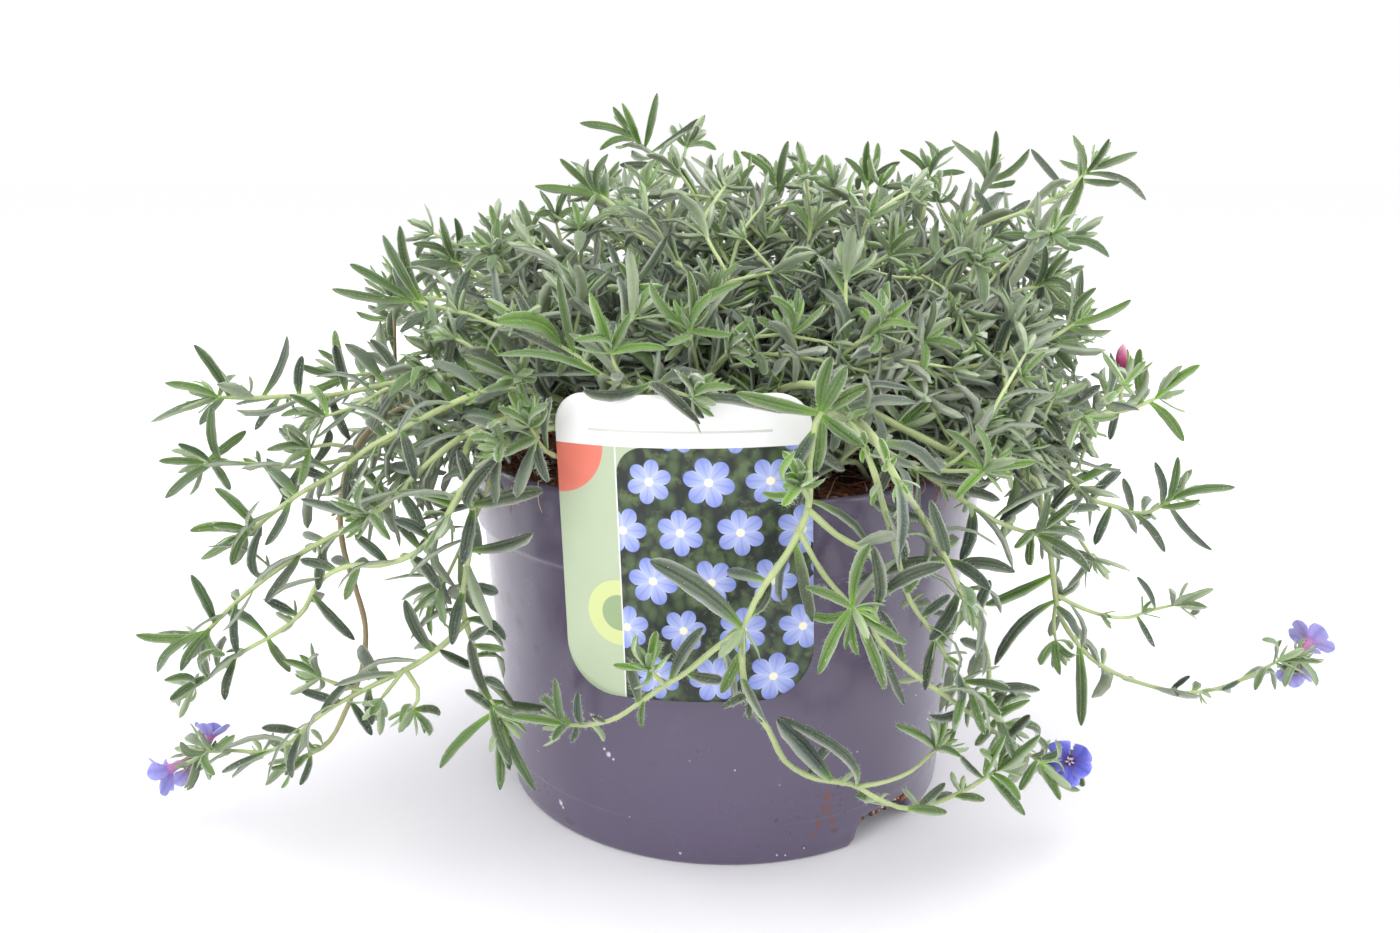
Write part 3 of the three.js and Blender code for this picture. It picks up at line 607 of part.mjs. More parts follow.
    stems: [
      { r: 0.65, sides: 4, steps: 6, points: [[20, 42, 101.3], [21.6, 44.8, 111.6], [25.8, 51.7, 119.1], [30.5, 59.5, 125.5], [35.6, 68, 130.5], [40.8, 77.3, 133.8], [45.9, 87.1, 135.5], [50.7, 97, 135.3], [55.3, 107, 133.4], [59.6, 116.5, 129.7]] },
      { on: 0, share: 0.398, r: 0.5, sides: 3, steps: 3, points: [[38.5, 70.1, 132.6], [44.6, 74.1, 136.8], [51.7, 75.8, 141], [59.2, 75.7, 144.9], [66.7, 74.7, 148.7]] },
      { on: 0, share: 0.5489, r: 0.5, sides: 3, steps: 3, points: [[42.7, 86.2, 135.7], [40, 95.4, 136.8], [34.2, 103.3, 137], [27.1, 110.1, 136.8]] },
      { on: 1, share: 0.4326, r: 0.5, sides: 3, steps: 2, points: [[50.1, 76.8, 137.8], [53, 80.4, 131.7], [56.1, 83.5, 125.8]] },
      { on: 1, share: 0.3013, r: 0.5, sides: 3, steps: 2, points: [[43.1, 76.5, 137.8], [35.9, 82.9, 141], [31, 88.4, 142.2]] },
      { on: 0, share: 0.201, r: 0.5, sides: 3, steps: 2, points: [[34.2, 63.6, 120.9], [45.8, 76.1, 102.4], [56.2, 87.9, 84.5]] },
    ],
    leaves: [
    ],
  },
  {
    name: 'shoot_back_6',
    stems: [
      { r: 0.65, sides: 4, steps: 8, points: [[34, 34, 101.3], [35.6, 35.6, 111.6], [41.5, 41.2, 118.4], [48.7, 48.1, 122.7], [56.2, 55.4, 125.5], [64, 62.9, 126.3], [71.8, 70.4, 125.2], [79.3, 77.6, 122.2], [86.3, 84.3, 117.2], [92.4, 90.3, 110.6], [97.5, 95.3, 102.4], [101.4, 99, 93], [104, 101.5, 82.7]] },
      { on: 0, share: 0.3478, r: 0.5, sides: 3, steps: 3, points: [[62.9, 64.1, 128.1], [65.3, 71.9, 131.8], [64.7, 79.6, 136.5], [62, 86.6, 141.6], [58.4, 93.2, 146.8]] },
      { on: 0, share: 0.4983, r: 0.5, sides: 3, steps: 3, points: [[80.3, 75.1, 123.8], [90, 75, 123.6], [99.2, 71.6, 124.2], [107.6, 66.6, 125.2]] },
      { on: 0, share: 0.2754, r: 0.5, sides: 3, steps: 2, points: [[57.9, 59.6, 122.7], [58.4, 69.7, 111.1], [60.3, 79, 99.1]] },
      { on: 1, share: 0.4318, r: 0.5, sides: 3, steps: 2, points: [[66.6, 77.9, 132.5], [70.3, 80.6, 125.7], [73.2, 83.6, 119.2]] },
      { on: 4, share: 0.118, r: 0.5, sides: 3, steps: 2, points: [[70.4, 79.8, 132.5], [81.2, 72.9, 131.8], [90.1, 68.8, 129]] },
      { on: 1, share: 0.2028, r: 0.5, sides: 3, steps: 2, points: [[63.3, 68, 130.7], [58.2, 70, 136.4], [54.6, 72.3, 139.7]] },
      { on: 0, share: 0.2197, r: 0.5, sides: 3, steps: 2, points: [[49, 53.2, 127.9], [37.7, 59.1, 140.7], [30.2, 65, 148.3]] },
      { on: 7, share: 0.906, r: 0.5, sides: 3, steps: 2, points: [[31.7, 65.7, 150.7], [40, 66.3, 157.4], [45.8, 67.2, 161.5]] },
    ],
    leaves: [
    ],
  },
  {
    name: 'shoot_back_7',
    stems: [
      { r: 0.65, sides: 4, steps: 5, points: [[42, 18, 101.3], [44.9, 19.5, 110.9], [51.2, 22.9, 118.6], [58.2, 26.7, 125.4], [66.1, 30.7, 131], [74.9, 34.6, 135.2], [84.4, 38.2, 137.9], [94.3, 41.7, 139], [104.2, 45.2, 138.4]] },
      { on: 0, share: 0.3972, r: 0.5, sides: 3, steps: 3, points: [[65.7, 32.5, 132], [69.5, 39.5, 137], [71, 47.8, 141.2], [70.9, 56.6, 144.6]] },
      { on: 0, share: 0.5978, r: 0.5, sides: 3, steps: 2, points: [[80.8, 35.1, 136.7], [88.6, 32.9, 137.1], [95.3, 28.5, 136.1], [101.1, 23.1, 134.5]] },
      { on: 0, share: 0.4765, r: 0.5, sides: 3, steps: 2, points: [[76.2, 32.1, 131.8], [89, 26.1, 122.2], [100.8, 22.1, 112.1]] },
      { on: 1, share: 0.5422, r: 0.5, sides: 3, steps: 2, points: [[70.9, 49.2, 139.8], [68.9, 58.9, 137], [67.7, 67.8, 133.1]] },
      { on: 2, share: 0.6251, r: 0.5, sides: 3, steps: 2, points: [[96, 26.7, 137.9], [95.6, 21.1, 145.3], [96.2, 16.1, 149.1]] },
      { on: 0, share: 0.268, r: 0.5, sides: 3, steps: 2, points: [[66.3, 25.7, 123.6], [83.6, 15.8, 106], [99.1, 9.1, 89.2]] },
    ],
    leaves: [
    ],
  },
  {
    name: 'shoot_back_8',
    stems: [
      { r: 0.65, sides: 4, steps: 5, points: [[-42, 16, 101.3], [-45, 17.3, 110.9], [-51.6, 19.9, 118.6], [-59, 22.9, 125.4], [-67.3, 26.2, 131], [-76.1, 30.2, 135.2], [-85.3, 34.4, 137.9], [-94.7, 39, 139], [-104.1, 43.6, 138.4]] },
      { on: 0, share: 0.3972, r: 0.5, sides: 3, steps: 3, points: [[-67, 28.1, 132.2], [-70.6, 35.1, 137.4], [-71.7, 43.5, 141.8], [-71.6, 52.6, 144.9]] },
      { on: 0, share: 0.5989, r: 0.5, sides: 3, steps: 2, points: [[-82, 30.8, 136.7], [-89.8, 28.6, 137.1], [-96.5, 24.1, 136.1], [-102.3, 18.6, 134.5]] },
      { on: 1, share: 0.3752, r: 0.5, sides: 3, steps: 2, points: [[-75.8, 40.2, 135.9], [-85.8, 45.1, 122], [-94.5, 50.6, 108.5]] },
      { on: 0, share: 0.4981, r: 0.5, sides: 3, steps: 2, points: [[-73.9, 28.3, 131.3], [-80.3, 28.1, 123.5], [-86.4, 28.5, 115.8]] },
      { on: 3, share: 0.1953, r: 0.5, sides: 3, steps: 2, points: [[-78.6, 41.1, 134.4], [-83.5, 39, 131.5], [-88, 38, 127.5]] },
    ],
    leaves: [
    ],
  },
  {
    name: 'shoot_back_9',
    stems: [
      { r: 0.65, sides: 4, steps: 6, points: [[-12, 30, 101.3], [-12.9, 32.7, 111.2], [-14.3, 37.3, 120.6], [-15.9, 42.6, 129.5], [-17.9, 48.6, 138], [-20.3, 55.3, 145.8], [-23.3, 62.5, 152.9], [-26.9, 70.2, 159.2], [-31.1, 78.2, 164.6], [-35.4, 86.7, 169.1]] },
      { on: 0, share: 0.4485, r: 0.5, sides: 3, steps: 3, points: [[-21.1, 53, 144.7], [-26, 55.5, 150.7], [-32.5, 55.9, 155.6], [-39.6, 54.8, 159.5], [-46.8, 53, 162.8]] },
      { on: 0, share: 0.599, r: 0.5, sides: 3, steps: 3, points: [[-21.8, 65.4, 155.3], [-17.4, 72.2, 160.6], [-10.4, 77.9, 164.2], [-2.2, 82.7, 166.7]] },
      { on: 1, share: 0.5332, r: 0.5, sides: 3, steps: 2, points: [[-35.5, 56.9, 155.5], [-41.2, 60.2, 152.1], [-46.5, 62.8, 148.4]] },
      { on: 0, share: 0.5359, r: 0.5, sides: 3, steps: 2, points: [[-19.2, 58.6, 147], [-12.6, 63.7, 145.1], [-7.6, 68.4, 142.7]] },
      { on: 0, share: 0.2757, r: 0.5, sides: 3, steps: 2, points: [[-16.8, 45.5, 135.8], [-18.2, 49.6, 149.1], [-19.6, 53.8, 158]] },
      { on: 5, share: 0.6024, r: 0.5, sides: 3, steps: 2, points: [[-19.2, 47.7, 153.5], [-21.9, 38.2, 161.8], [-24.2, 31.2, 167.1]] },
    ],
    leaves: [
    ],
  },
  {
    name: 'shoot_back_10',
    stems: [
      { r: 0.65, sides: 4, steps: 6, points: [[18, 30, 101.3], [19, 32.6, 111.2], [20.8, 36.7, 120.8], [23, 41.4, 129.9], [25.4, 46.9, 138.6], [27.9, 53.1, 146.7], [30.6, 60.1, 154.2], [33, 67.9, 160.9], [35.3, 76.4, 166.8], [37.8, 85.3, 171.8]] },
      { on: 0, share: 0.4483, r: 0.5, sides: 3, steps: 3, points: [[25.9, 52.1, 145.6], [23.8, 57.1, 151.6], [19.3, 61.7, 156.5], [13.4, 65.8, 160.3], [6.8, 69.5, 163.5]] },
      { on: 0, share: 0.5984, r: 0.5, sides: 3, steps: 3, points: [[33.5, 61.1, 156.6], [41.3, 63.3, 161.9], [50.4, 63, 165.5], [59.7, 61.3, 167.8]] },
      { on: 0, share: 0.3127, r: 0.5, sides: 3, steps: 2, points: [[23.7, 44.9, 138.6], [21.4, 46.8, 151.6], [19.9, 49.2, 160.4]] },
    ],
    leaves: [
    ],
  },
  {
    name: 'shoot_back_11',
    stems: [
      { r: 0.65, sides: 4, steps: 5, points: [[-30, -2, 101.3], [-33, -2.1, 111.2], [-38, -2.4, 120.6], [-43.8, -2.8, 129.4], [-50.6, -3.2, 137.6], [-58.1, -2.8, 145.1], [-66.4, -1.9, 151.7], [-75.3, -0.6, 157.3], [-84.8, 0.7, 161.9]] },
      { on: 0, share: 0.448, r: 0.5, sides: 3, steps: 3, points: [[-53.6, -4.7, 141.7], [-58, -10, 148.2], [-60.5, -19, 153.6], [-62.3, -27.1, 157.6]] },
      { on: 0, share: 0.5987, r: 0.5, sides: 3, steps: 3, points: [[-63.2, -0.1, 150.2], [-67.7, 6.6, 155.5], [-70.1, 15.3, 159.1], [-71.2, 24.6, 161.7]] },
      { on: 0, share: 0.2895, r: 0.5, sides: 3, steps: 2, points: [[-40.7, -4.2, 125.9], [-37.9, -9.8, 125.8], [-36, -14.2, 125.1]] },
    ],
    leaves: [
    ],
  },
  {
    name: 'shoot_back_12',
    stems: [
      { r: 0.65, sides: 4, steps: 5, points: [[38, -4, 101.3], [41.3, -3.9, 111.7], [47, -3.8, 121.4], [53.7, -3.8, 130.5], [61.3, -3.6, 138.7], [69.8, -3.4, 146.1], [79.1, -3, 152.4], [89.1, -2.5, 157.6], [99.6, -1.8, 161.6]] },
      { on: 0, share: 0.4479, r: 0.5, sides: 3, steps: 3, points: [[64.2, -1.6, 142.7], [68.3, 4.1, 149.3], [70.3, 12, 154.5], [71.1, 20.6, 158.7]] },
      { on: 0, share: 0.5984, r: 0.5, sides: 3, steps: 3, points: [[74.9, -5.3, 150.7], [79.9, -11.6, 155.9], [82.8, -20.3, 159.8], [84.5, -29.8, 162.6]] },
      { on: 1, share: 0.2922, r: 0.5, sides: 3, steps: 2, points: [[72.5, 1.4, 146.9], [84.3, -4.3, 138.6], [94.5, -7.9, 130.4]] },
      { on: 0, share: 0.3523, r: 0.5, sides: 3, steps: 2, points: [[57.9, -5.3, 131.2], [64.1, -10.9, 123.5], [69.7, -15.3, 116.2]] },
    ],
    leaves: [
    ],
  },
];

// ---------------------------------------------------------------- shapes
// Closed three.js geometry to a solid that can be joined or cut.
function solid(geometry) {
  const g = geometry.clone();
  for (const name of Object.keys(g.attributes)) if (name !== 'position') g.deleteAttribute(name);
  const m = mergeVertices(g, 1e-4);
  const mesh = new wasm.Mesh({
    numProp: 3,
    vertProperties: Float32Array.from(m.attributes.position.array),
    triVerts: Uint32Array.from(m.index.array),
  });
  return new wasm.Manifold(mesh);
}

// Solid back to a three.js geometry.
function geometryOf(body) {
  const mesh = body.getMesh();
  const g = new THREE.BufferGeometry();
  g.setAttribute('position', new THREE.BufferAttribute(Float32Array.from(mesh.vertProperties), 3));
  g.setIndex(new THREE.BufferAttribute(Uint32Array.from(mesh.triVerts), 1));
  g.computeVertexNormals();
  return g;
}

// A stem is a thin rod of few sides along a smooth curve.
function rodGeometry(points, radius, sides, steps) {
  const shape = new THREE.Shape();
  for (let i = 0; i < sides; i++) {
    const a = (i / sides) * Math.PI * 2 + 0.4;
    if (i === 0) shape.moveTo(radius * Math.cos(a), radius * Math.sin(a));
    else shape.lineTo(radius * Math.cos(a), radius * Math.sin(a));
  }
  shape.closePath();
  const path = new THREE.CatmullRomCurve3(points, false, 'catmullrom', 0.5);
  return new THREE.ExtrudeGeometry(shape, { extrudePath: path, steps, bevelEnabled: false, curveSegments: 1 });
}

// The straight pieces that a rod of so many steps really follows.
function chordPoint(points, steps, share) {
  const path = new THREE.CatmullRomCurve3(points, false, 'catmullrom', 0.5);
  const p = path.getSpacedPoints(steps);
  const x = Math.min(Math.max(share, 0), 1) * steps, k = Math.min(Math.floor(x), steps - 1);
  return p[k].clone().lerp(p[k + 1], x - k);
}

// A leaf is a flat spindle from its foot on the stem to its tip, bowed towards its upper face.
function leafGeometry(foot, tip, width, up, bow) {
  const along = tip.clone().sub(foot), length = along.length(), y = along.clone().normalize();
  const z = up.clone().addScaledVector(y, -up.dot(y)).normalize();
  const x = y.clone().cross(z);
  const g = new THREE.OctahedronGeometry(1, 0);
  g.scale(width / 2, length / 2, LEAF_THICK / 2);
  const p = g.attributes.position;
  for (let i = 0; i < p.count; i++) {
    if (Math.abs(p.getY(i)) < length / 4) { p.setZ(i, p.getZ(i) + bow * length); p.setY(i, p.getY(i) - length * 0.04); }
  }
  g.translate(0, length / 2, 0);
  g.applyMatrix4(new THREE.Matrix4().makeBasis(x, y, z).setPosition(foot));
  return g;
}

// ---------------------------------------------------------------- pot
function potBody() {
  const inner = (z) => POT.baseR + (POT.collarFootR - POT.baseR) * (z / POT.collarZ) - POT.wall;
  const v = (r, z) => new THREE.Vector2(r, z);
  const profile = [
    v(0, 0), v(POT.baseR - 1.2, 0), v(POT.baseR, 1.2),
    v(POT.baseR + (POT.collarFootR - POT.baseR) * (POT.ringZ / POT.collarZ), POT.ringZ),
    v(POT.collarFootR, POT.collarZ), v(POT.collarR, POT.collarZ + 0.9),
    v(POT.collarR, POT.height - 0.8), v(POT.collarR - 0.5, POT.height), v(POT.collarR - 0.9, POT.height),
    v(POT.collarR - 1.3, POT.height - 0.6), v(POT.collarR - 1.3, POT.collarZ + 2.6),
    v(inner(POT.collarZ), POT.collarZ + 1.0), v(inner(POT.floor), POT.floor), v(0, POT.floor),
  ];
  const turned = new THREE.LatheGeometry(profile, POT.segments);
  turned.rotateX(Math.PI / 2);
  let pot = solid(turned);
  if (pot.volume() < 0) throw new Error('pot profile is inside out');
  for (const a of POT.notchAngles) {
    const cut = new THREE.BoxGeometry(POT.notchWidth, 14, POT.notchHeight + 4);
    cut.translate(0, -(POT.baseR - 1.5), POT.notchHeight / 2 - 2);
    cut.rotateZ(a * Math.PI / 180);
    pot = pot.subtract(solid(cut));
  }
  return pot;
}
// ---------------------------------------------------------------- root ball
function soilBody() {
  const inner = (z) => POT.baseR + (POT.collarFootR - POT.baseR) * (z / POT.collarZ) - POT.wall - GAP - 0.2;
  const v = (r, z) => new THREE.Vector2(r, z);
  const z0 = POT.floor + GAP;
  const g = new THREE.LatheGeometry([
    v(0, z0), v(inner(z0), z0), v(inner(POT.collarZ) + 0.0, POT.collarZ - 0.2), v(SOIL.topR, POT.collarZ + 3.2),
    v(SOIL.topR, SOIL.top - 1.2), v(SOIL.topR - 1.5, SOIL.top - 0.3), v(0, SOIL.top),
  ], POT.segments);
  g.rotateX(Math.PI / 2);
  return solid(g);
}
// ---------------------------------------------------------------- plant label
function labelBody() {
  const rad = Math.PI / 180;
  // A flat outline (width along x, height along z) in fine strips, then wrapped on a cylinder round the pot.
  const w = CARD.width / 2, h = CARD.height / 2, rt = CARD.topCorner, rb = CARD.footCorner;
  const s = new THREE.Shape();
  s.moveTo(-w + rb, -h); s.lineTo(w - rb, -h); s.absarc(w - rb, -h + rb, rb, -Math.PI / 2, 0, false);
  s.lineTo(w, h - rt); s.absarc(w - rt, h - rt, rt, 0, Math.PI / 2, false);
  s.lineTo(-w + rt, h); s.absarc(-w + rt, h - rt, rt, Math.PI / 2, Math.PI, false);
  s.lineTo(-w, -h + rb); s.absarc(-w + rb, -h + rb, rb, Math.PI, Math.PI * 1.5, false);
  const outline = new THREE.ExtrudeGeometry(s, { depth: 30, bevelEnabled: false, curveSegments: 5 });
  outline.rotateX(Math.PI / 2);                        // outline now in x, z; depth along -y
  outline.rotateY(CARD.tilt * rad);
  outline.translate(0, -60, CARD.middle);
  const ring = new THREE.Shape();
  const a0 = -Math.PI / 2 - 30 * rad, a1 = -Math.PI / 2 + 30 * rad;
  ring.absarc(0, 0, CARD.radius + CARD.thick, a0, a1, false);
  ring.absarc(0, 0, CARD.radius, a1, a0, true);
  ring.closePath();
  const sheet = new THREE.ExtrudeGeometry(ring, { depth: CARD.height + 20, bevelEnabled: false, curveSegments: 14 });
  sheet.translate(0, 0, CARD.middle - CARD.height / 2 - 10);
  let body = solid(sheet).intersect(solid(outline));
  // Tongue over the rim and down inside.
  const t = new THREE.Shape();
  const zi = POT.height + 0.5, ro = CARD.tongueR, rin = ro - CARD.tongueThick;
  t.moveTo(CARD.radius + 0.25, zi); t.lineTo(CARD.radius + 0.25, zi + CARD.tongueThick);
  t.lineTo(rin, zi + CARD.tongueThick); t.lineTo(rin, CARD.tongueFoot); t.lineTo(ro, CARD.tongueFoot); t.lineTo(ro, zi);
  t.closePath();
  const tongue = new THREE.ExtrudeGeometry(t, { depth: CARD.tongueWidth, steps: 3, bevelEnabled: false });
  const p = tongue.attributes.position;
  for (let i = 0; i < p.count; i++) {
    const r = p.getX(i), z = p.getY(i), a = -Math.PI / 2 - (p.getZ(i) - CARD.tongueWidth / 2) / CARD.radius;
    p.setXYZ(i, r * Math.cos(a), r * Math.sin(a), z);
  }
  let tb = solid(tongue);
  if (tb.volume() < 0) throw new Error('tongue inside out');
  body = body.add(tb);
  const g = geometryOf(body);
  g.rotateZ(CARD.angle * rad);
  return solid(g);
}
// ---------------------------------------------------------------- crown
function crownBody() {
  const v = (r, z) => new THREE.Vector2(r, z);
  const z0 = SOIL.top + GAP;
  const g = new THREE.LatheGeometry([
    v(0, z0), v(CROWN.r, z0), v(CROWN.r * 1.02, z0 + CROWN.h * 0.35), v(CROWN.r * 0.7, z0 + CROWN.h * 0.85), v(0, z0 + CROWN.h),
  ], 12);
  g.rotateX(Math.PI / 2);
  return solid(g);
}
// ---------------------------------------------------------------- flowers
// throat: centre of the open face; aim: the way the face looks; tube runs back from the throat.
function flowerBody({ throat, aim, size, tube, turn }) {
  const d = V(aim).normalize();
  const shape = new THREE.Shape();
  const n = 5, k = 4;
  for (let i = 0; i < n * k; i++) {
    const a = (i / (n * k)) * Math.PI * 2, m = i % k;
    const r = size * [0.42, 0.92, 1.0, 0.92][m] * 0.97;
    if (i === 0) shape.moveTo(r * Math.cos(a), r * Math.sin(a)); else shape.lineTo(r * Math.cos(a), r * Math.sin(a));
  }
  shape.closePath();
  const face = new THREE.ExtrudeGeometry(shape, { depth: 0.9, bevelEnabled: false });
  face.rotateZ(turn || 0);
  face.translate(0, 0, -0.4);
  const stalk = new THREE.CylinderGeometry(FLOWER.throatR, FLOWER.tubeR, tube, 8, 1);
  stalk.rotateX(Math.PI / 2); stalk.translate(0, 0, -tube / 2);
  let body = solid(face).add(solid(stalk));
  const g = geometryOf(body);
  const q = new THREE.Quaternion().setFromUnitVectors(new THREE.Vector3(0, 0, 1), d);
  g.applyQuaternion(q); g.translate(throat[0], throat[1], throat[2]);
  return solid(g);
}
function budBody({ foot, aim, length, r }) {
  const d = V(aim).normalize();
  const v = (a, b) => new THREE.Vector2(a, b);
  const g = new THREE.LatheGeometry([v(0, 0), v(r * 0.55, 0), v(r, length * 0.35), v(r * 0.75, length * 0.7), v(0, length)], 8);
  g.rotateX(Math.PI / 2);
  const q = new THREE.Quaternion().setFromUnitVectors(new THREE.Vector3(0, 0, 1), d);
  g.applyQuaternion(q); g.translate(foot[0], foot[1], foot[2]);
  return solid(g);
}

function shootBody(shoot) {
  const stems = [];
  let body = null;
  for (const s of shoot.stems) {
    const points = s.points.map(V);
    if (s.on !== undefined) {
      const parent = stems[s.on];
      points.unshift(chordPoint(parent.points, parent.steps, s.share));
    }
    stems.push({ points, steps: s.steps });
    const rod = solid(rodGeometry(points, s.r, s.sides, s.steps));
    body = body ? body.add(rod) : rod;
  }
  for (const [on, share, x, y, z, width, ux, uy, uz, bow] of shoot.leaves) {
    const s = stems[on];
    const foot = chordPoint(s.points, s.steps, share);
    body = body.add(solid(leafGeometry(foot, V([x, y, z]), width, V([ux, uy, uz]), bow)));
  }
  return body;
}

// ---------------------------------------------------------------- the object
const plant = new THREE.Group();
function piece(parent, name, body, color, roughness) {
  const mesh = new THREE.Mesh(geometryOf(body), new THREE.MeshStandardMaterial({ color, roughness, metalness: 0 }));
  mesh.name = name;
  parent.add(mesh);
  return mesh;
}
piece(plant, 'pot', potBody(), 0x736a80, 0.55);
piece(plant, 'root_ball', soilBody(), 0x4a2f22, 0.95);
piece(plant, 'plant_label', labelBody(), 0x2f4a3a, 0.4);
const growth = new THREE.Group();
plant.add(growth);
piece(growth, 'crown', crownBody(), 0x6b5138, 0.9);
SHOOTS.forEach((shoot, i) => {
  const tint = new THREE.Color(0x5f7a4c).offsetHSL(0, 0, ((i * 7) % 5 - 2) * 0.015);
  piece(growth, shoot.name, shootBody(shoot), tint, 0.7);
});
for (const [name, flower] of Object.entries(FLOWERS)) piece(growth, name, flowerBody(flower), 0x8c84e6, 0.6);
piece(growth, 'flower_bud', budBody(BUD), 0xa85a8c, 0.6);

export default plant;
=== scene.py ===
# Potted lithodora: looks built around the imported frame. Metres, +Z up, front of the pot towards -Y.
import bpy
import math
import random
import numpy as np
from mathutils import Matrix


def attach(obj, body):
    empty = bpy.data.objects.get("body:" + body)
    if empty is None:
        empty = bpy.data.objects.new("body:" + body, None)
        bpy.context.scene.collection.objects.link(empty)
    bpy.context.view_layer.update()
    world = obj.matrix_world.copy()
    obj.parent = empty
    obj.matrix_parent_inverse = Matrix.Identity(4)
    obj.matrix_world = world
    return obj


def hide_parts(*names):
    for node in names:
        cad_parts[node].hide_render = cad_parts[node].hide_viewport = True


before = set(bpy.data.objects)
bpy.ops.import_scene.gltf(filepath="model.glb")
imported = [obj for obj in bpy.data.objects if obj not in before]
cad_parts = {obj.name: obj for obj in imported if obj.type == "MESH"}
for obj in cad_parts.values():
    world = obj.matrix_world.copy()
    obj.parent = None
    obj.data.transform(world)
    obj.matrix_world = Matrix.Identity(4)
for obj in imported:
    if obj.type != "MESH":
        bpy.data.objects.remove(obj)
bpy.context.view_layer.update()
rng = np.random.default_rng(20)
MM = 0.001

# ---------------------------------------------------------------- camera, light, floor
scene = bpy.context.scene
cam_data = bpy.data.cameras.new("camera")
cam_data.sensor_fit = "HORIZONTAL"
cam_data.sensor_width = 36.0
cam_data.lens = 28.75
cam_data.clip_start = 0.01
cam = bpy.data.objects.new("camera", cam_data)
cam.location = (-0.0076, -0.328, 0.1775)
cam.rotation_euler = (math.radians(90 - 14.54), 0, 0)
scene.collection.objects.link(cam)
scene.camera = cam
scene.view_settings.view_transform = "Standard"


def area(name, loc, size, power, target=(0, 0, 0.1), color=(1, 1, 1)):
    data = bpy.data.lights.new(name, "AREA")
    data.shape = "SQUARE"
    data.size = size
    data.energy = power
    data.color = color
    o = bpy.data.objects.new(name, data)
    o.location = loc
    d = np.array(target, float) - np.array(loc, float)
    d /= np.linalg.norm(d)
    o.rotation_euler = (math.acos(-d[2]), 0, math.atan2(-d[0], d[1]))
    scene.collection.objects.link(o)
    return o


area("light_top", (0.05, -0.15, 1.25), 1.3, 9.0)
area("light_front_left", (-1.0, -1.1, 0.75), 1.0, 7.0)
area("light_front_right", (1.1, -0.9, 0.6), 1.0, 5.0)
area("light_back", (0.2, 1.3, 0.8), 1.2, 6.0)
area("light_rim_right", (1.25, 0.55, 0.3), 0.9, 11.0)
area("light_rim_left", (-1.25, 0.5, 0.3), 0.9, 9.0)

world = bpy.data.worlds.new("studio")
scene.world = world
world.use_nodes = True
wn = world.node_tree.nodes["Background"]
wn.inputs["Color"].default_value = (1.0, 1.0, 1.0, 1)
wn.inputs["Strength"].default_value = 1.0


# ---------------------------------------------------------------- small node language
def srgb(r, g, b):
    def f(c):
        c /= 255.0
        return c / 12.92 if c <= 0.04045 else ((c + 0.055) / 1.055) ** 2.4
    return (f(r), f(g), f(b))


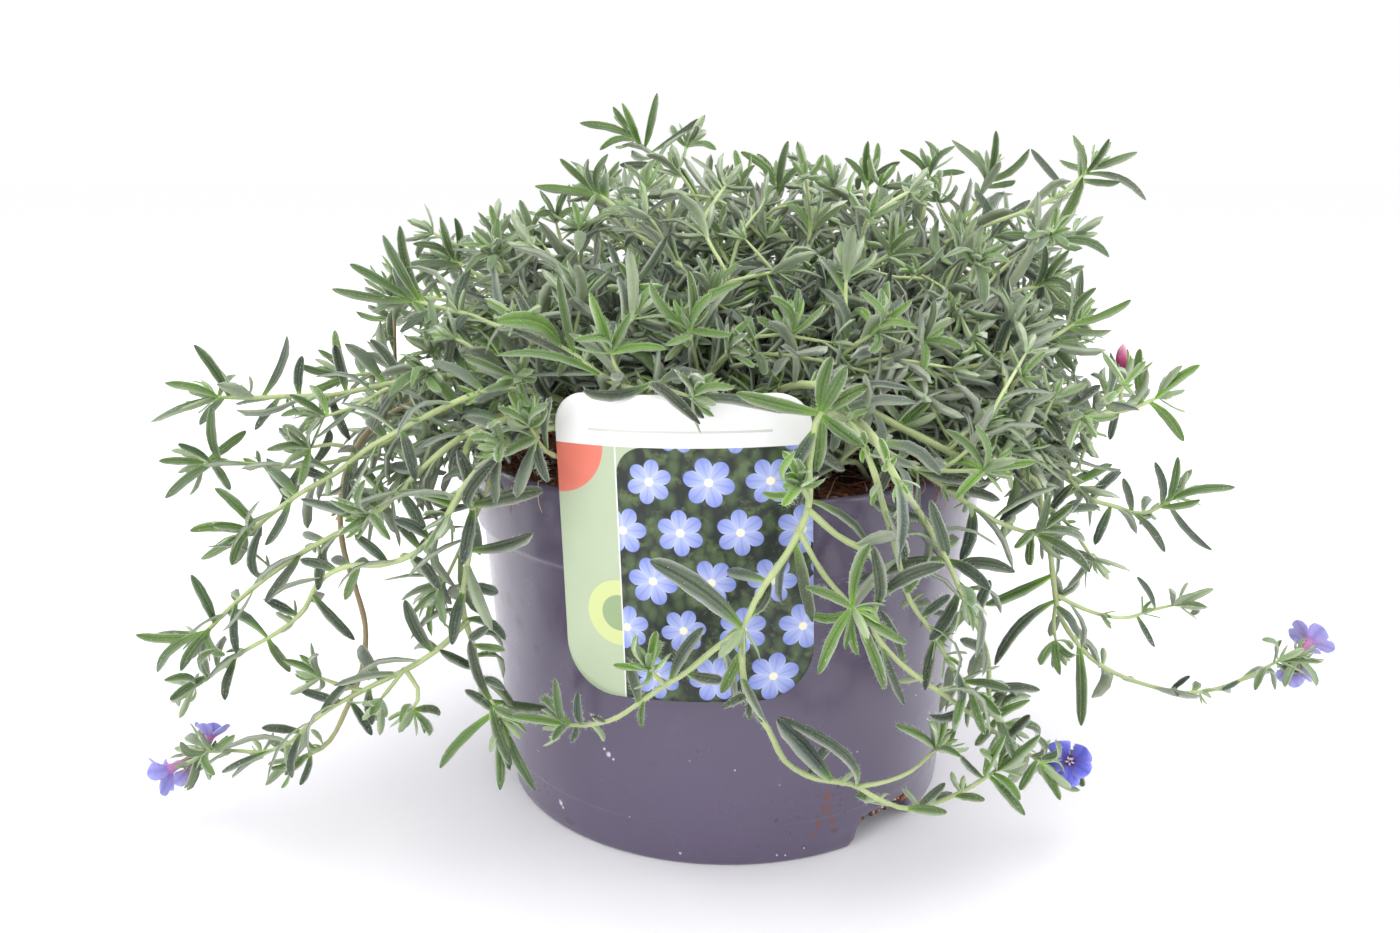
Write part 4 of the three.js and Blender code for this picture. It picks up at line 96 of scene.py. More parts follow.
class Nodes:
    """Builds a material: sockets in, sockets out."""

    def __init__(self, name):
        self.m = bpy.data.materials.new(name)
        self.m.use_nodes = True
        self.t = self.m.node_tree
        self.p = self.t.nodes["Principled BSDF"]

    def new(self, kind, **kw):
        n = self.t.nodes.new(kind)
        for k, v in kw.items():
            setattr(n, k, v)
        return n

    def put(self, sock, v):
        if hasattr(v, "links") or isinstance(v, bpy.types.NodeSocket):
            self.t.links.new(v, sock)
        elif isinstance(v, (tuple, list)) and len(v) == 3 and sock.type == "RGBA":
            sock.default_value = (*v, 1)
        else:
            sock.default_value = v

    def math(self, op, a, b=None, c=None, clamp=False):
        n = self.new("ShaderNodeMath", operation=op, use_clamp=clamp)
        for i, v in enumerate((a, b, c)):
            if v is not None:
                self.put(n.inputs[i], v)
        return n.outputs[0]

    def vmath(self, op, a, b=None, scale=None):
        n = self.new("ShaderNodeVectorMath", operation=op)
        self.put(n.inputs[0], a)
        if b is not None:
            self.put(n.inputs[1], b)
        if scale is not None:
            self.put(n.inputs["Scale"], scale)
        return n.outputs["Value"] if op in ("DISTANCE", "LENGTH", "DOT_PRODUCT") else n.outputs[0]

    def step(self, x, lo, hi):
        """0 below lo, 1 above hi, smooth between (lo may be above hi)."""
        n = self.new("ShaderNodeMapRange", interpolation_type="SMOOTHSTEP")
        self.put(n.inputs[0], x)
        if lo <= hi:
            vals = (lo, hi, 0.0, 1.0)
        else:
            vals = (hi, lo, 1.0, 0.0)
        for i, v in enumerate(vals):
            n.inputs[i + 1].default_value = v
        return n.outputs[0]

    def remap(self, x, a, b, c, d):
        n = self.new("ShaderNodeMapRange")
        self.put(n.inputs[0], x)
        for i, v in enumerate((a, b, c, d)):
            n.inputs[i + 1].default_value = v
        return n.outputs[0]

    def mix(self, f, a, b, blend="MIX"):
        n = self.new("ShaderNodeMix", data_type="RGBA", blend_type=blend)
        self.put(n.inputs["Factor"], f)
        self.put(n.inputs[6], a)
        self.put(n.inputs[7], b)
        return n.outputs[2]

    def coord(self):
        return self.new("ShaderNodeTexCoord").outputs["Object"]

    def scaled(self, v, s):
        n = self.new("ShaderNodeMapping")
        self.put(n.inputs["Vector"], v)
        n.inputs["Scale"].default_value = s if isinstance(s, (tuple, list)) else (s, s, s)
        return n.outputs[0]

    def noise(self, v, scale, detail=2.0, rough=0.5, out="Fac"):
        n = self.new("ShaderNodeTexNoise")
        self.put(n.inputs["Vector"], v)
        n.inputs["Scale"].default_value = scale
        n.inputs["Detail"].default_value = detail
        n.inputs["Roughness"].default_value = rough
        return n.outputs[0] if out == "Fac" else n.outputs[1]

    def voronoi(self, v, scale, feature="F1", out=0):
        n = self.new("ShaderNodeTexVoronoi", feature=feature)
        self.put(n.inputs["Vector"], v)
        n.inputs["Scale"].default_value = scale
        return n.outputs[out]

    def attr(self, name, out="Fac"):
        n = self.new("ShaderNodeAttribute", attribute_name=name)
        return n.outputs[out]

    def bump(self, h, strength, dist):
        n = self.new("ShaderNodeBump")
        self.put(n.inputs["Height"], h)
        n.inputs["Strength"].default_value = strength
        n.inputs["Distance"].default_value = dist
        self.put(self.p.inputs["Normal"], n.outputs[0])

    def finish(self, color, rough, **kw):
        self.put(self.p.inputs["Base Color"], color)
        self.put(self.p.inputs["Roughness"], rough)
        for k, v in kw.items():
            self.p.inputs[k].default_value = v
        return self.m


# ---------------------------------------------------------------- mesh helpers
def make(name, verts_mm, quads=None, tris=None, polys=None, col=None, attrs=None, mat=None, smooth=True):
    me = bpy.data.meshes.new(name)
    V = np.asarray(verts_mm, np.float64) * MM
    sizes, idx = [], []
    for a, k in ((quads, 4), (tris, 3)):
        if a is not None and len(a):
            a = np.asarray(a, np.int32).reshape(-1, k)
            sizes.append(np.full(len(a), k, np.int32))
            idx.append(a.reshape(-1))
    for p in polys or ():
        sizes.append(np.array([len(p)], np.int32))
        idx.append(np.asarray(p, np.int32))
    sizes = np.concatenate(sizes)
    idx = np.concatenate(idx)
    me.vertices.add(len(V))
    me.vertices.foreach_set("co", V.astype(np.float32).reshape(-1))
    me.loops.add(len(idx))
    me.loops.foreach_set("vertex_index", idx)
    me.polygons.add(len(sizes))
    me.polygons.foreach_set("loop_start", np.r_[0, np.cumsum(sizes)[:-1]].astype(np.int32))
    me.update(calc_edges=True)
    me.validate()
    me.polygons.foreach_set("use_smooth", np.full(len(me.polygons), smooth))
    if col is not None:
        a = me.color_attributes.new("Col", "FLOAT_COLOR", "POINT")
        c = np.c_[np.asarray(col, np.float32), np.ones(len(V), np.float32)]
        a.data.foreach_set("color", c.reshape(-1))
    for k, v in (attrs or {}).items():
        a = me.attributes.new(k, "FLOAT", "POINT")
        a.data.foreach_set("value", np.asarray(v, np.float32))
    o = bpy.data.objects.new(name, me)
    scene.collection.objects.link(o)
    if mat is not None:
        me.materials.append(mat)
    return o


class Bag:
    """Collects pieces of one mesh."""

    def __init__(self):
        self.v, self.q, self.t, self.c, self.n = [], [], [], [], 0
        self.p = []

    def add(self, v, q=None, t=None, c=None, p=None):
        v = np.asarray(v, float).reshape(-1, 3)
        if q is not None and len(q):
            self.q.append(np.asarray(q, np.int64).reshape(-1, 4) + self.n)
        if t is not None and len(t):
            self.t.append(np.asarray(t, np.int64).reshape(-1, 3) + self.n)
        for x in p or ():
            self.p.append([int(i) + self.n for i in x])
        self.v.append(v)
        c = np.asarray(c, float)
        if c.ndim == 1:
            c = np.tile(c, (len(v), 1))
        self.c.append(c)
        self.n += len(v)

    def tris(self):
        return sum(len(a) for a in self.q) * 2 + sum(len(a) for a in self.t) + sum(len(a) - 2 for a in self.p)

    def make(self, name, mat, smooth=True):
        return make(name, np.concatenate(self.v), np.concatenate(self.q) if self.q else None,
                    np.concatenate(self.t) if self.t else None, self.p, np.concatenate(self.c), None, mat, smooth)


def unit(a):
    a = np.asarray(a, float)
    return a / (np.linalg.norm(a, axis=-1, keepdims=True) + 1e-12)


def cr(pts, per):
    """Smooth curve through points, per samples a stretch."""
    pts = np.asarray(pts, float)
    n = len(pts)
    P = np.vstack([2 * pts[0] - pts[1], pts, 2 * pts[-1] - pts[-2]])
    t = (np.arange(per) / per)[None, :, None]
    p0, p1, p2, p3 = (P[k:k + n - 1][:, None] for k in range(4))
    c = 0.5 * (2 * p1 + (-p0 + p2) * t + (2 * p0 - 5 * p1 + 4 * p2 - p3) * t ** 2 + (-p0 + 3 * p1 - 3 * p2 + p3) * t ** 3)
    return np.vstack([c.reshape(-1, 3), pts[-1]])


def even(c, step):
    d = np.r_[0, np.cumsum(np.linalg.norm(np.diff(c, axis=0), axis=1))]
    n = max(2, int(round(d[-1] / step)))
    t = np.linspace(0, d[-1], n + 1)
    return np.stack([np.interp(t, d, c[:, k]) for k in range(3)], 1), t / max(d[-1], 1e-9)


def frames(c):
    """Tangents and a normal that turns as little as possible."""
    T = unit(np.gradient(c, axis=0))
    n = np.cross(T[0], [0, 0, 1.0])
    if np.linalg.norm(n) < 0.1:
        n = np.cross(T[0], [1.0, 0, 0])
    N = [unit(n)]
    for k in range(1, len(c)):
        m = N[-1] - T[k] * (N[-1] @ T[k])
        N.append(unit(m))
    N = np.array(N)
    return T, N, np.cross(T, N)


def tube(bag, c, r, sides, col, cap=True):
    T, N, B = frames(c)
    r = np.broadcast_to(r, (len(c),))
    a = np.arange(sides) / sides * 2 * math.pi
    v = c[:, None] + (N[:, None] * np.cos(a)[None, :, None] + B[:, None] * np.sin(a)[None, :, None]) * r[:, None, None]
    k, j = np.meshgrid(np.arange(len(c) - 1), np.arange(sides), indexing="ij")
    q = np.stack([k * sides + j, k * sides + (j + 1) % sides, (k + 1) * sides + (j + 1) % sides, (k + 1) * sides + j], -1).reshape(-1, 4)
    n = len(c) * sides
    p = [list(range(sides))[::-1], list(range(n - sides, n))] if cap else None
    col = np.asarray(col, float)
    if col.ndim == 2:
        col = np.repeat(col, sides, axis=0)
    bag.add(v, q, None, col, p)


# ---------------------------------------------------------------- pot
POT_H, BASE_R, COLLAR_Z, COLLAR_FOOT_R, COLLAR_R = 103.0, 67.0, 81.4, 73.4, 75.2
NOTCHES = [41.0, 161.0, -79.0]
NOTCH_W, NOTCH_H = 25.0, 8.0


def build_pot():
    out = [(0.0, 1.6), (51.0, 1.6), (60.5, 1.6), (61.5, 1.3), (62.2, .3), (63.0, 0), (65.8, 0), (66.7, .35), (BASE_R + .05, 1.0)]
    body = lambda z: BASE_R + (COLLAR_FOOT_R - .9 - BASE_R) * z / COLLAR_Z
    zs = [3, 6, 9, 11.2, 12.0, 12.25, 12.5, 13.0, 14.5, 18, 24, 32, 40, 48, 56, 64, 72, 77, 80]
    out += [(body(z) + (.18 if z > 12.1 else 0), z) for z in zs]
    out += [(72.7, 80.9), (73.0, 81.3), (74.0, 81.7), (74.45, 82.2), (74.55, 83), (74.75, 88), (74.95, 94), (75.1, 99), (75.2, 101.2), (75.15, 102.2), (74.85, 102.8), (74.4, 103.0), (73.95, 102.85), (73.7, 102.3), (73.6, 101), (73.4, 97), (73.2, 93)]
    prof = np.array(out)
    seg = 256
    a = np.arange(seg) / seg * 2 * math.pi
    K = len(prof)
    r, z = prof[:, 0][:, None], prof[:, 1][:, None]
    wob = .22 * np.sin(2 * a + .6)[None] * (z / 103) + .1 * np.sin(3 * a + 2)[None] * (z / 103)
    front = np.degrees(np.arctan2(np.cos(a) * 0 + np.sin(a), -np.cos(a)))  # angle from the front, towards +X
    # around the pot: a = 0 at the front
    R = r + np.where(r > 20, wob, 0)
    Z = np.repeat(z, seg, axis=1).astype(float)
    # the drainage notches lift the foot of the wall
    deg = np.degrees(a)
    for c in NOTCHES:
        d = (deg - c + 180) % 360 - 180
        half = math.degrees(NOTCH_W / 2 / BASE_R)
        lift = np.clip((half - np.abs(d)) / 2.4, 0, 1)
        lift = lift * lift * (3 - 2 * lift)
        for k in range(K):
            zz = prof[k, 1]
            if zz < NOTCH_H + 1.2 and 1 < k < 15:
                top = NOTCH_H + (zz / (NOTCH_H + 1.2)) * 1.2
                Z[k] = Z[k] * (1 - lift) + np.maximum(top, zz) * lift
    x = R * np.sin(a)[None]
    y = -R * np.cos(a)[None]
    V = np.stack([x, y, Z], -1).reshape(-1, 3)
    V = V.reshape(K, seg, 3)
    V[0, :, :2] = 0
    k, j = np.meshgrid(np.arange(1, K - 1), np.arange(seg), indexing="ij")
    q = np.stack([k * seg + j, k * seg + (j + 1) % seg, (k + 1) * seg + (j + 1) % seg, (k + 1) * seg + j], -1).reshape(-1, 4)
    flat = V.reshape(-1, 3)
    centre = len(flat)
    flat = np.vstack([flat, [[0, 0, 1.6]]])
    tri = np.array([(centre, seg + (i + 1) % seg, seg + i) for i in range(seg)])
    return flat, q, tri


def pot_material():
    n = Nodes("pot_plastic")
    o = n.coord()
    mm = n.vmath("SCALE", o, scale=1000.0)
    sep = n.new("ShaderNodeSeparateXYZ")
    n.put(sep.inputs[0], mm)
    x, y, z = sep.outputs
    ang = n.math("ARCTAN2", x, n.math("MULTIPLY", y, -1.0))
    arc = n.math("MULTIPLY", ang, 70.0)
    comb = n.new("ShaderNodeCombineXYZ")
    n.put(comb.inputs[0], arc)
    n.put(comb.inputs[2], z)
    flat = comb.outputs[0]
    base = srgb(108, 99, 119)
    col = n.mix(n.noise(n.scaled(flat, (.02, 1, .012)), 1.0, 3.0), srgb(80, 70, 95), srgb(87, 77, 102))
    # faint upright scratches
    scratch = n.noise(n.scaled(flat, (1.1, 1, .05)), 1.0, 4.0, .65)
    col = n.mix(n.math("MULTIPLY", n.step(scratch, .60, .78), .16), col, srgb(128, 119, 138))
    # dull film of dried water
    film = n.noise(n.scaled(flat, .05), 1.0, 5.0, .65)
    col = n.mix(n.math("MULTIPLY", n.step(film, .54, .74), .14), col, srgb(120, 110, 128))

    def blob(cx, cz, rx, rz, soft=.6, wob=.5, ns=.5):
        """1 inside a ragged patch around (arc cx, height cz)."""
        dx = n.math("DIVIDE", n.math("SUBTRACT", arc, cx), rx)
        dz = n.math("DIVIDE", n.math("SUBTRACT", z, cz), rz)
        d = n.math("SQRT", n.math("ADD", n.math("MULTIPLY", dx, dx), n.math("MULTIPLY", dz, dz)))
        w = n.math("MULTIPLY", n.math("SUBTRACT", n.noise(n.scaled(flat, ns), 1.0, 3.0, .6), .5), wob * 2)
        return n.step(n.math("ADD", d, w), 1.0, 1.0 - soft)

    # dark patches, the strongest high on the left
    for c in DARK_PATCHES:
        col = n.mix(n.math("MULTIPLY", blob(*c[:4], .9, .35, .35), c[4]), col, srgb(62, 55, 66))
    # dirt and root stains
    for c in STAINS:
        col = n.mix(n.math("MULTIPLY", blob(*c[:4], .5, .8, .9), c[4]), col, c[5])
    # lime specks
    fleck = n.voronoi(n.scaled(flat, .16), 1.0)
    pick = n.noise(n.scaled(flat, .03), 1.0, 2.0)
    spk = n.math("MULTIPLY", n.step(fleck, .085, .05), n.step(pick, .53, .6))
    low = n.step(z, 70.0, 5.0)
    col = n.mix(n.math("MULTIPLY", spk, n.math("ADD", n.math("MULTIPLY", low, .5), .2)), col, srgb(206, 198, 206))
    for cx, cz, rr in SPECKS:
        col = n.mix(n.math("MULTIPLY", blob(cx, cz, rr, rr * 1.1, .8, .5, 1.2), .8), col, srgb(226, 219, 226))
    rough = n.remap(n.noise(n.scaled(flat, .08), 1.0, 4.0), .3, .7, .25, .36)
    rough = n.math("ADD", rough, n.math("MULTIPLY", n.step(film, .5, .7), .08))
    h = n.math("ADD", n.math("MULTIPLY", n.noise(n.scaled(flat, 2.2), 1.0, 3.0), .35), n.math("MULTIPLY", scratch, .15))
    h = n.math("ADD", h, n.math("MULTIPLY", n.noise(n.scaled(flat, .06), 1.0, 2.0), 2.0))
    n.bump(h, .35, .00025)
    m = n.finish(col, rough, **{"Specular IOR Level": .5, "IOR": 1.49})
    m.node_tree.nodes["Principled BSDF"].inputs["Coat Weight"].default_value = .55
    m.node_tree.nodes["Principled BSDF"].inputs["Coat Roughness"].default_value = .18
    return m


DARK_PATCHES = [(-70.5, 64.4, 4.6, 3.4, .95), (-77.0, 62.5, 3.0, 2.4, .8), (-65.5, 59.5, 3.2, 2.8, .9), (-57.3, 54.3, 2.2, 1.8, .75), (-72.0, 57.0, 1.6, 4.0, .4), (-62.0, 66.5, 2.2, 1.4, .35),
           (-20.0, 30.0, 3.0, 1.6, .18), (40.0, 52.0, 5.0, 2.0, .16), (-48.0, 36.0, 2.0, 4.0, .16),
           (150.0, 60.0, 4.0, 3.0, .6), (176.0, 40.0, 3.0, 2.4, .5), (-140.0, 52.0, 3.0, 3.4, .5)]
RUST = srgb(112, 62, 40)
EARTH = srgb(58, 42, 36)
PINK = srgb(168, 138, 132)
STAINS = [(27.4, 18.6, 1.0, 2.4, .9, RUST), (28.6, 14.0, .6, 3.0, .8, RUST), (31.5, 16.0, .4, 1.4, .7, RUST), (29.8, 10.5, 1.3, 1.2, .8, RUST), (33.6, 12.0, .7, .7, .7, EARTH), (30.4, 21.0, .5, .7, .7, EARTH), (24.6, 13.0, .4, .5, .7, EARTH), (26.4, 15.0, .7, 2.6, .85, RUST), (25.2, 10.6, .7, 2.6, .8, RUST), (23.8, 7.0, .6, 1.6, .75, RUST),
          (30.8, 7.1, 1.5, 1.0, .7, srgb(84, 54, 48)), (12.8, 13.7, .9, .8, .6, EARTH), (21.4, 3.9, 1.0, .8, .6, EARTH), (17.0, 9.0, .5, .5, .6, EARTH), (8.0, 6.0, .5, .4, .5, EARTH),
          (76.5, 15.5, 3.4, 7.5, .85, EARTH), (75.0, 19.0, 1.6, 2.4, .6, PINK), (79.0, 12.0, 1.6, 4.0, .6, PINK), (74.6, 10.0, .9, 1.2, .7, RUST),
          (47.0, 10.6, 5.0, 1.0, .4, EARTH), (55.0, 9.6, 4.0, 1.3, .5, EARTH), (-50.0, 3.4, 3.0, 1.2, .35, EARTH),
          (170.0, 12.0, 5.0, 3.0, .6, EARTH), (-120.0, 9.0, 3.0, 5.0, .5, EARTH), (-165.0, 20.0, 1.0, 4.0, .5, RUST)]
SPECKS = [(-33.4, 29.9, 1.0), (-31.9, 28.8, .5), (-34.6, 31.2, .5), (-53.2, 8.0, 1.1), (-52.3, 6.8, .6), (-39.0, 38.0, .5), (-60.0, 31.0, .6), (-13.5, 3.3, .5), (1.4, 29.6, .34), (13.5, 2.7, .42), (15.9, 2.3, .34), (21.4, 3.6, .38), (36.0, 30.0, .3), (-28.0, 12.0, .3), (58.0, 40.0, .3), (-66.0, 30.0, .3)]

pot_mat = pot_material()
pv, pq, pt = build_pot()
pot = make("pot_wall", pv, pq, pt, None, np.tile([.2, .2, .2], (len(pv), 1)), None, pot_mat)
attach(pot, "root")
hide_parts("pot")


# ---------------------------------------------------------------- soil
def wave(x, y, s, seed):
    """Smooth bumps from a few turned sine waves."""
    r = np.random.default_rng(seed)
    h = 0
    for _ in range(7):
        a, f, p = r.uniform(0, 6.28), s * r.uniform(.6, 1.6), r.uniform(0, 6.28)
        h = h + np.sin((x * math.cos(a) + y * math.sin(a)) * f + p)
    return h / 7


def build_soil():
    R, rings, seg = 72.3, 60, 200
    rr = np.sqrt(np.linspace(0, 1, rings + 1)[1:]) * R
    a = np.arange(seg) / seg * 2 * math.pi
    x = np.r_[[0], (rr[:, None] * np.cos(a)).ravel()]
    y = np.r_[[0], (rr[:, None] * np.sin(a)).ravel()]
    rad = np.hypot(x, y) / R
    z = 98.4 + wave(x, y, .12, 3) * 2.2 + wave(x, y, .5, 4) * 1.5 + np.abs(wave(x, y, 1.4, 5)) * 1.6 + np.random.default_rng(6).uniform(-.5, .5, len(x))
    z += 2.2 * np.clip((.5 - rad) / .5, 0, 1)
    z = np.where(rad > .985, np.minimum(z, 98.0), np.clip(z, 96, 102.2))
    v = np.stack([x, y, z], 1)
    q = []
    for k in range(rings - 1):
        for j in range(seg):
            q.append((1 + k * seg + j, 1 + (k + 1) * seg + j, 1 + (k + 1) * seg + (j + 1) % seg, 1 + k * seg + (j + 1) % seg))
    t = [(0, 1 + j, 1 + (j + 1) % seg) for j in range(seg)]
    # the hidden part of the root ball, down to the floor of the pot
    n = len(v)
    low = []
    for rz, zz in ((72.0, 91), (69.6, 76), (67.2, 40), (64.0, 12.0)):
        low.append(np.stack([rz * np.cos(a), rz * np.sin(a), np.full(seg, float(zz))], 1))
    v = np.vstack([v] + low + [[[0, 0, 12.0]]])
    ring0 = 1 + (rings - 1) * seg
    prev = ring0
    for k in range(4):
        cur = n + k * seg
        for j in range(seg):
            q.append((prev + j, cur + j, cur + (j + 1) % seg, prev + (j + 1) % seg))
        prev = cur
    c = n + 4 * seg
    for j in range(seg):
        t.append((c, prev + (j + 1) % seg, prev + j))
    return v, np.array(q), np.array(t)


def soil_material():
    n = Nodes("soil_coir")
    o = n.coord()
    big = n.noise(o, 60.0, 4.0, .6)
    fine = n.noise(o, 420.0, 4.0, .65)
    col = n.mix(n.step(big, .35, .65), srgb(96, 60, 46), srgb(148, 98, 74))
    col = n.mix(n.step(fine, .5, .72), col, srgb(172, 124, 98))
    col = n.mix(n.step(fine, .46, .30), col, srgb(52, 34, 28))
    h = n.math("ADD", n.math("MULTIPLY", big, 1.5), fine)
    n.bump(h, .8, .0012)
    return n.finish(col, n.remap(fine, .3, .7, .8, .98), **{"Specular IOR Level": .25})


def vertex_material(name, rough, noise_scale, lo, hi, bump=.25, dist=.0002, sheen=0.0, spec=.5, coat=0.0):
    n = Nodes(name)
    o = n.coord()
    c = n.attr("Col", "Color")
    f = n.noise(o, noise_scale, 3.0, .6)
    col = n.mix(n.step(f, .3, .7), n.vmath("MULTIPLY", c, (lo, lo, lo)), n.vmath("MULTIPLY", c, (hi, hi, hi)))
    n.bump(n.noise(o, noise_scale * 2.2, 3.0, .6), bump, dist)
    m = n.finish(col, n.remap(f, .3, .7, rough - .06, rough + .08), **{"Specular IOR Level": spec})
    p = n.p
    if sheen:
        p.inputs["Sheen Weight"].default_value = sheen
        p.inputs["Sheen Roughness"].default_value = .45
        p.inputs["Sheen Tint"].default_value = (1, 1, 1, 1)
    if coat:
        p.inputs["Coat Weight"].default_value = coat
    return m


sv, sq, st = build_soil()
soil_mat = soil_material()
soil = make("soil", sv, sq, st, None, None, None, soil_mat)
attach(soil, "root")
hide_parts("root_ball")

fibre_mat = vertex_material("coir_fibre", .85, 900.0, .8, 1.15, spec=.3)


def fibre_mesh():
    b = Bag()
    r = np.random.default_rng(11)
    tones = [srgb(168, 112, 84), srgb(130, 84, 64), srgb(196, 156, 136), srgb(92, 58, 46), srgb(214, 184, 170), srgb(150, 96, 70)]
    for i in range(FIBRES):
        rim = r.random() < .55
        rad = r.uniform(58, 72.6) if rim else 71 * math.sqrt(r.random())
        a = r.uniform(0, 6.283)
        L = r.uniform(5, 17)
        h = r.uniform(0, 6.283)
        curl = r.normal(0, 1.1)
        n = 7
        p = [np.array([rad * math.cos(a), rad * math.sin(a), r.uniform(98.2, 101.0)])]
        el = r.uniform(-.05, .45)
        for k in range(n):
            h += curl / n + r.normal(0, .16)
            el += r.normal(-.05, .16)
            q = p[-1] + np.array([math.cos(h) * math.cos(el), math.sin(h) * math.cos(el), math.sin(el)]) * L / n
            rq = math.hypot(q[0], q[1])
            if q[2] < 98.4:
                q[2] = 98.4
            if rq > 72.4 and q[2] < 103.5:
                q[:2] *= 72.4 / rq
                h += 1.2
            q[2] = min(q[2], 107.0)
            p.append(q)
        tube(b, np.array(p), np.linspace(r.uniform(.14, .34), .07, n + 1), 4, np.array(tones[r.integers(len(tones))]))
    # crumbs
    for i in range(CRUMBS):
        rad = 71.5 * math.sqrt(r.random())
        a = r.uniform(0, 6.283)
        s = r.uniform(.5, 1.7)
        c = np.array([rad * math.cos(a), rad * math.sin(a), 99.0 + s * .4 + r.uniform(-.4, .9)])
        v = unit(r.normal(0, 1, (8, 3)) * .35 + np.array([[-1, -1, -1], [1, -1, -1], [1, 1, -1], [-1, 1, -1], [-1, -1, 1], [1, -1, 1], [1, 1, 1], [-1, 1, 1]]))
        v = v * s * r.uniform(.6, 1.0, 3) + c
        b.add(v, [(0, 3, 2, 1), (4, 5, 6, 7), (0, 1, 5, 4), (1, 2, 6, 5), (2, 3, 7, 6), (3, 0, 4, 7)], None, np.array(tones[r.integers(4)]) * r.uniform(.6, 1.1))
    # fibres hanging over the rim on both sides of the front, and a few at the back
    for (a0, n_f) in ((-62, 7), (-48, 4), (38, 4), (52, 6), (66, 4), (150, 4), (-150, 4), (100, 3)):
        for i in range(n_f):
            an = math.radians(a0 + r.uniform(-8, 8))
            e = np.array([math.sin(an), -math.cos(an), 0])
            s = np.array([math.cos(an), math.sin(an), 0])
            ln = r.uniform(2, 9)
            off = r.uniform(-3, 3)
            p = [e * 68 + [0, 0, 99.6], e * 72.2 + [0, 0, 102.4] + s * off * .3, e * 74.6 + [0, 0, 103.7] + s * off * .6,
                 e * 76.0 + [0, 0, 103.2 - ln * .1] + s * off, e * (76.2 + r.uniform(0, .8)) + [0, 0, 103.0 - ln * .6] + s * off * 1.4, e * (76.0 + r.uniform(-.2, 1.6)) + [0, 0, 103.0 - ln] + s * off * 1.9]
            c, _ = even(cr(p, 4), 2.0)
            tube(b, c, np.linspace(.26, .09, len(c)), 4, np.array(tones[[0, 2, 4, 5][r.integers(4)]]))
    # crumbs caught in the drainage notch
    for i in range(26):
        an = math.radians(41 + r.uniform(-8, 9))
        s = r.uniform(.3, 1.0)
        c = np.array([math.sin(an) * 66.9, -math.cos(an) * 66.9, 7.6 + r.uniform(-.6, 1.4)])
        v = unit(r.normal(0, 1, (8, 3)) * .3 + np.array([[-1, -1, -1], [1, -1, -1], [1, 1, -1], [-1, 1, -1], [-1, -1, 1], [1, -1, 1], [1, 1, 1], [-1, 1, 1]]))
        b.add(v * s + c, [(0, 3, 2, 1), (4, 5, 6, 7), (0, 1, 5, 4), (1, 2, 6, 5), (2, 3, 7, 6), (3, 0, 4, 7)], None, np.array(tones[[0, 3, 4, 1][r.integers(4)]]))
    return b


FIBRES = 800
CRUMBS = 700
fibres = fibre_mesh().make("soil_fibres", fibre_mat)
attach(fibres, "root")


# ---------------------------------------------------------------- plant label
def build_label():
    w, h, rt, rb = 30.9, 38.15, 8.5, 13.0
    tilt, turn, R = math.radians(-1.7), math.radians(-9.0), 77.0
    xs = []
    for k in range(13):
        xs.append(-w + rb * (1 - math.cos(math.pi / 2 * k / 12)))
    xs += list(np.linspace(-w + rb, w - rb, 22)[1:-1])
    for k in range(12, -1, -1):
        xs.append(w - rb * (1 - math.cos(math.pi / 2 * k / 12)))
    xs = np.array(xs)
    d = w - np.abs(xs)
    lo = -h + np.where(d < rb, rb - np.sqrt(np.maximum(0, rb ** 2 - (rb - d) ** 2)), 0)
    hi = h - np.where(d < rt, rt - np.sqrt(np.maximum(0, rt ** 2 - (rt - d) ** 2)), 0)
    rows = 40
    f = np.linspace(0, 1, rows)
    X = np.repeat(xs[None], rows, 0)
    Zf = lo[None] + (hi - lo)[None] * f[:, None]
    x = X * math.cos(tilt) + Zf * math.sin(tilt)
    z = -X * math.sin(tilt) + Zf * math.cos(tilt) + 90.9

    def place(x, r, z):
        y = -np.sqrt(r * r - x * x)
        return np.stack([x * math.cos(turn) - y * math.sin(turn), x * math.sin(turn) + y * math.cos(turn), z], -1)
    # the card is a little wavy at its free edges
    curl = .45 * np.clip(-Zf / h - .2, 0, 1) ** 2 + .25 * (X / w) ** 2 * np.clip(Zf / h, 0, 1)
    fr = place(x, R + .5 + curl, z)
    bk = place(x, R + curl, z)
    C = len(xs)
    V = np.vstack([fr.reshape(-1, 3), bk.reshape(-1, 3)])
    n = rows * C
    k, j = np.meshgrid(np.arange(rows - 1), np.arange(C - 1), indexing="ij")
    a = (k * C + j).ravel()
    q = [np.stack([a, a + 1, a + C + 1, a + C], 1), np.stack([a, a + C, a + C + 1, a + 1], 1) + n]
    per = [(0, j) for j in range(C)] + [(k, C - 1) for k in range(1, rows)] + [(rows - 1, j) for j in range(C - 2, -1, -1)] + [(k, 0) for k in range(rows - 2, 0, -1)]
    ids = np.array([k * C + j for k, j in per])
    nx = np.roll(ids, -1)
    q.append(np.stack([ids, ids + n, nx + n, nx], 1))
    Q = np.vstack(q)
    lu = np.r_[X.ravel(), X.ravel()]
    lv = np.r_[Zf.ravel(), Zf.ravel()] + h
    face = np.r_[np.ones(n), np.zeros(n)]
    return V, Q, {"lu": lu, "lv": lv, "face": face}


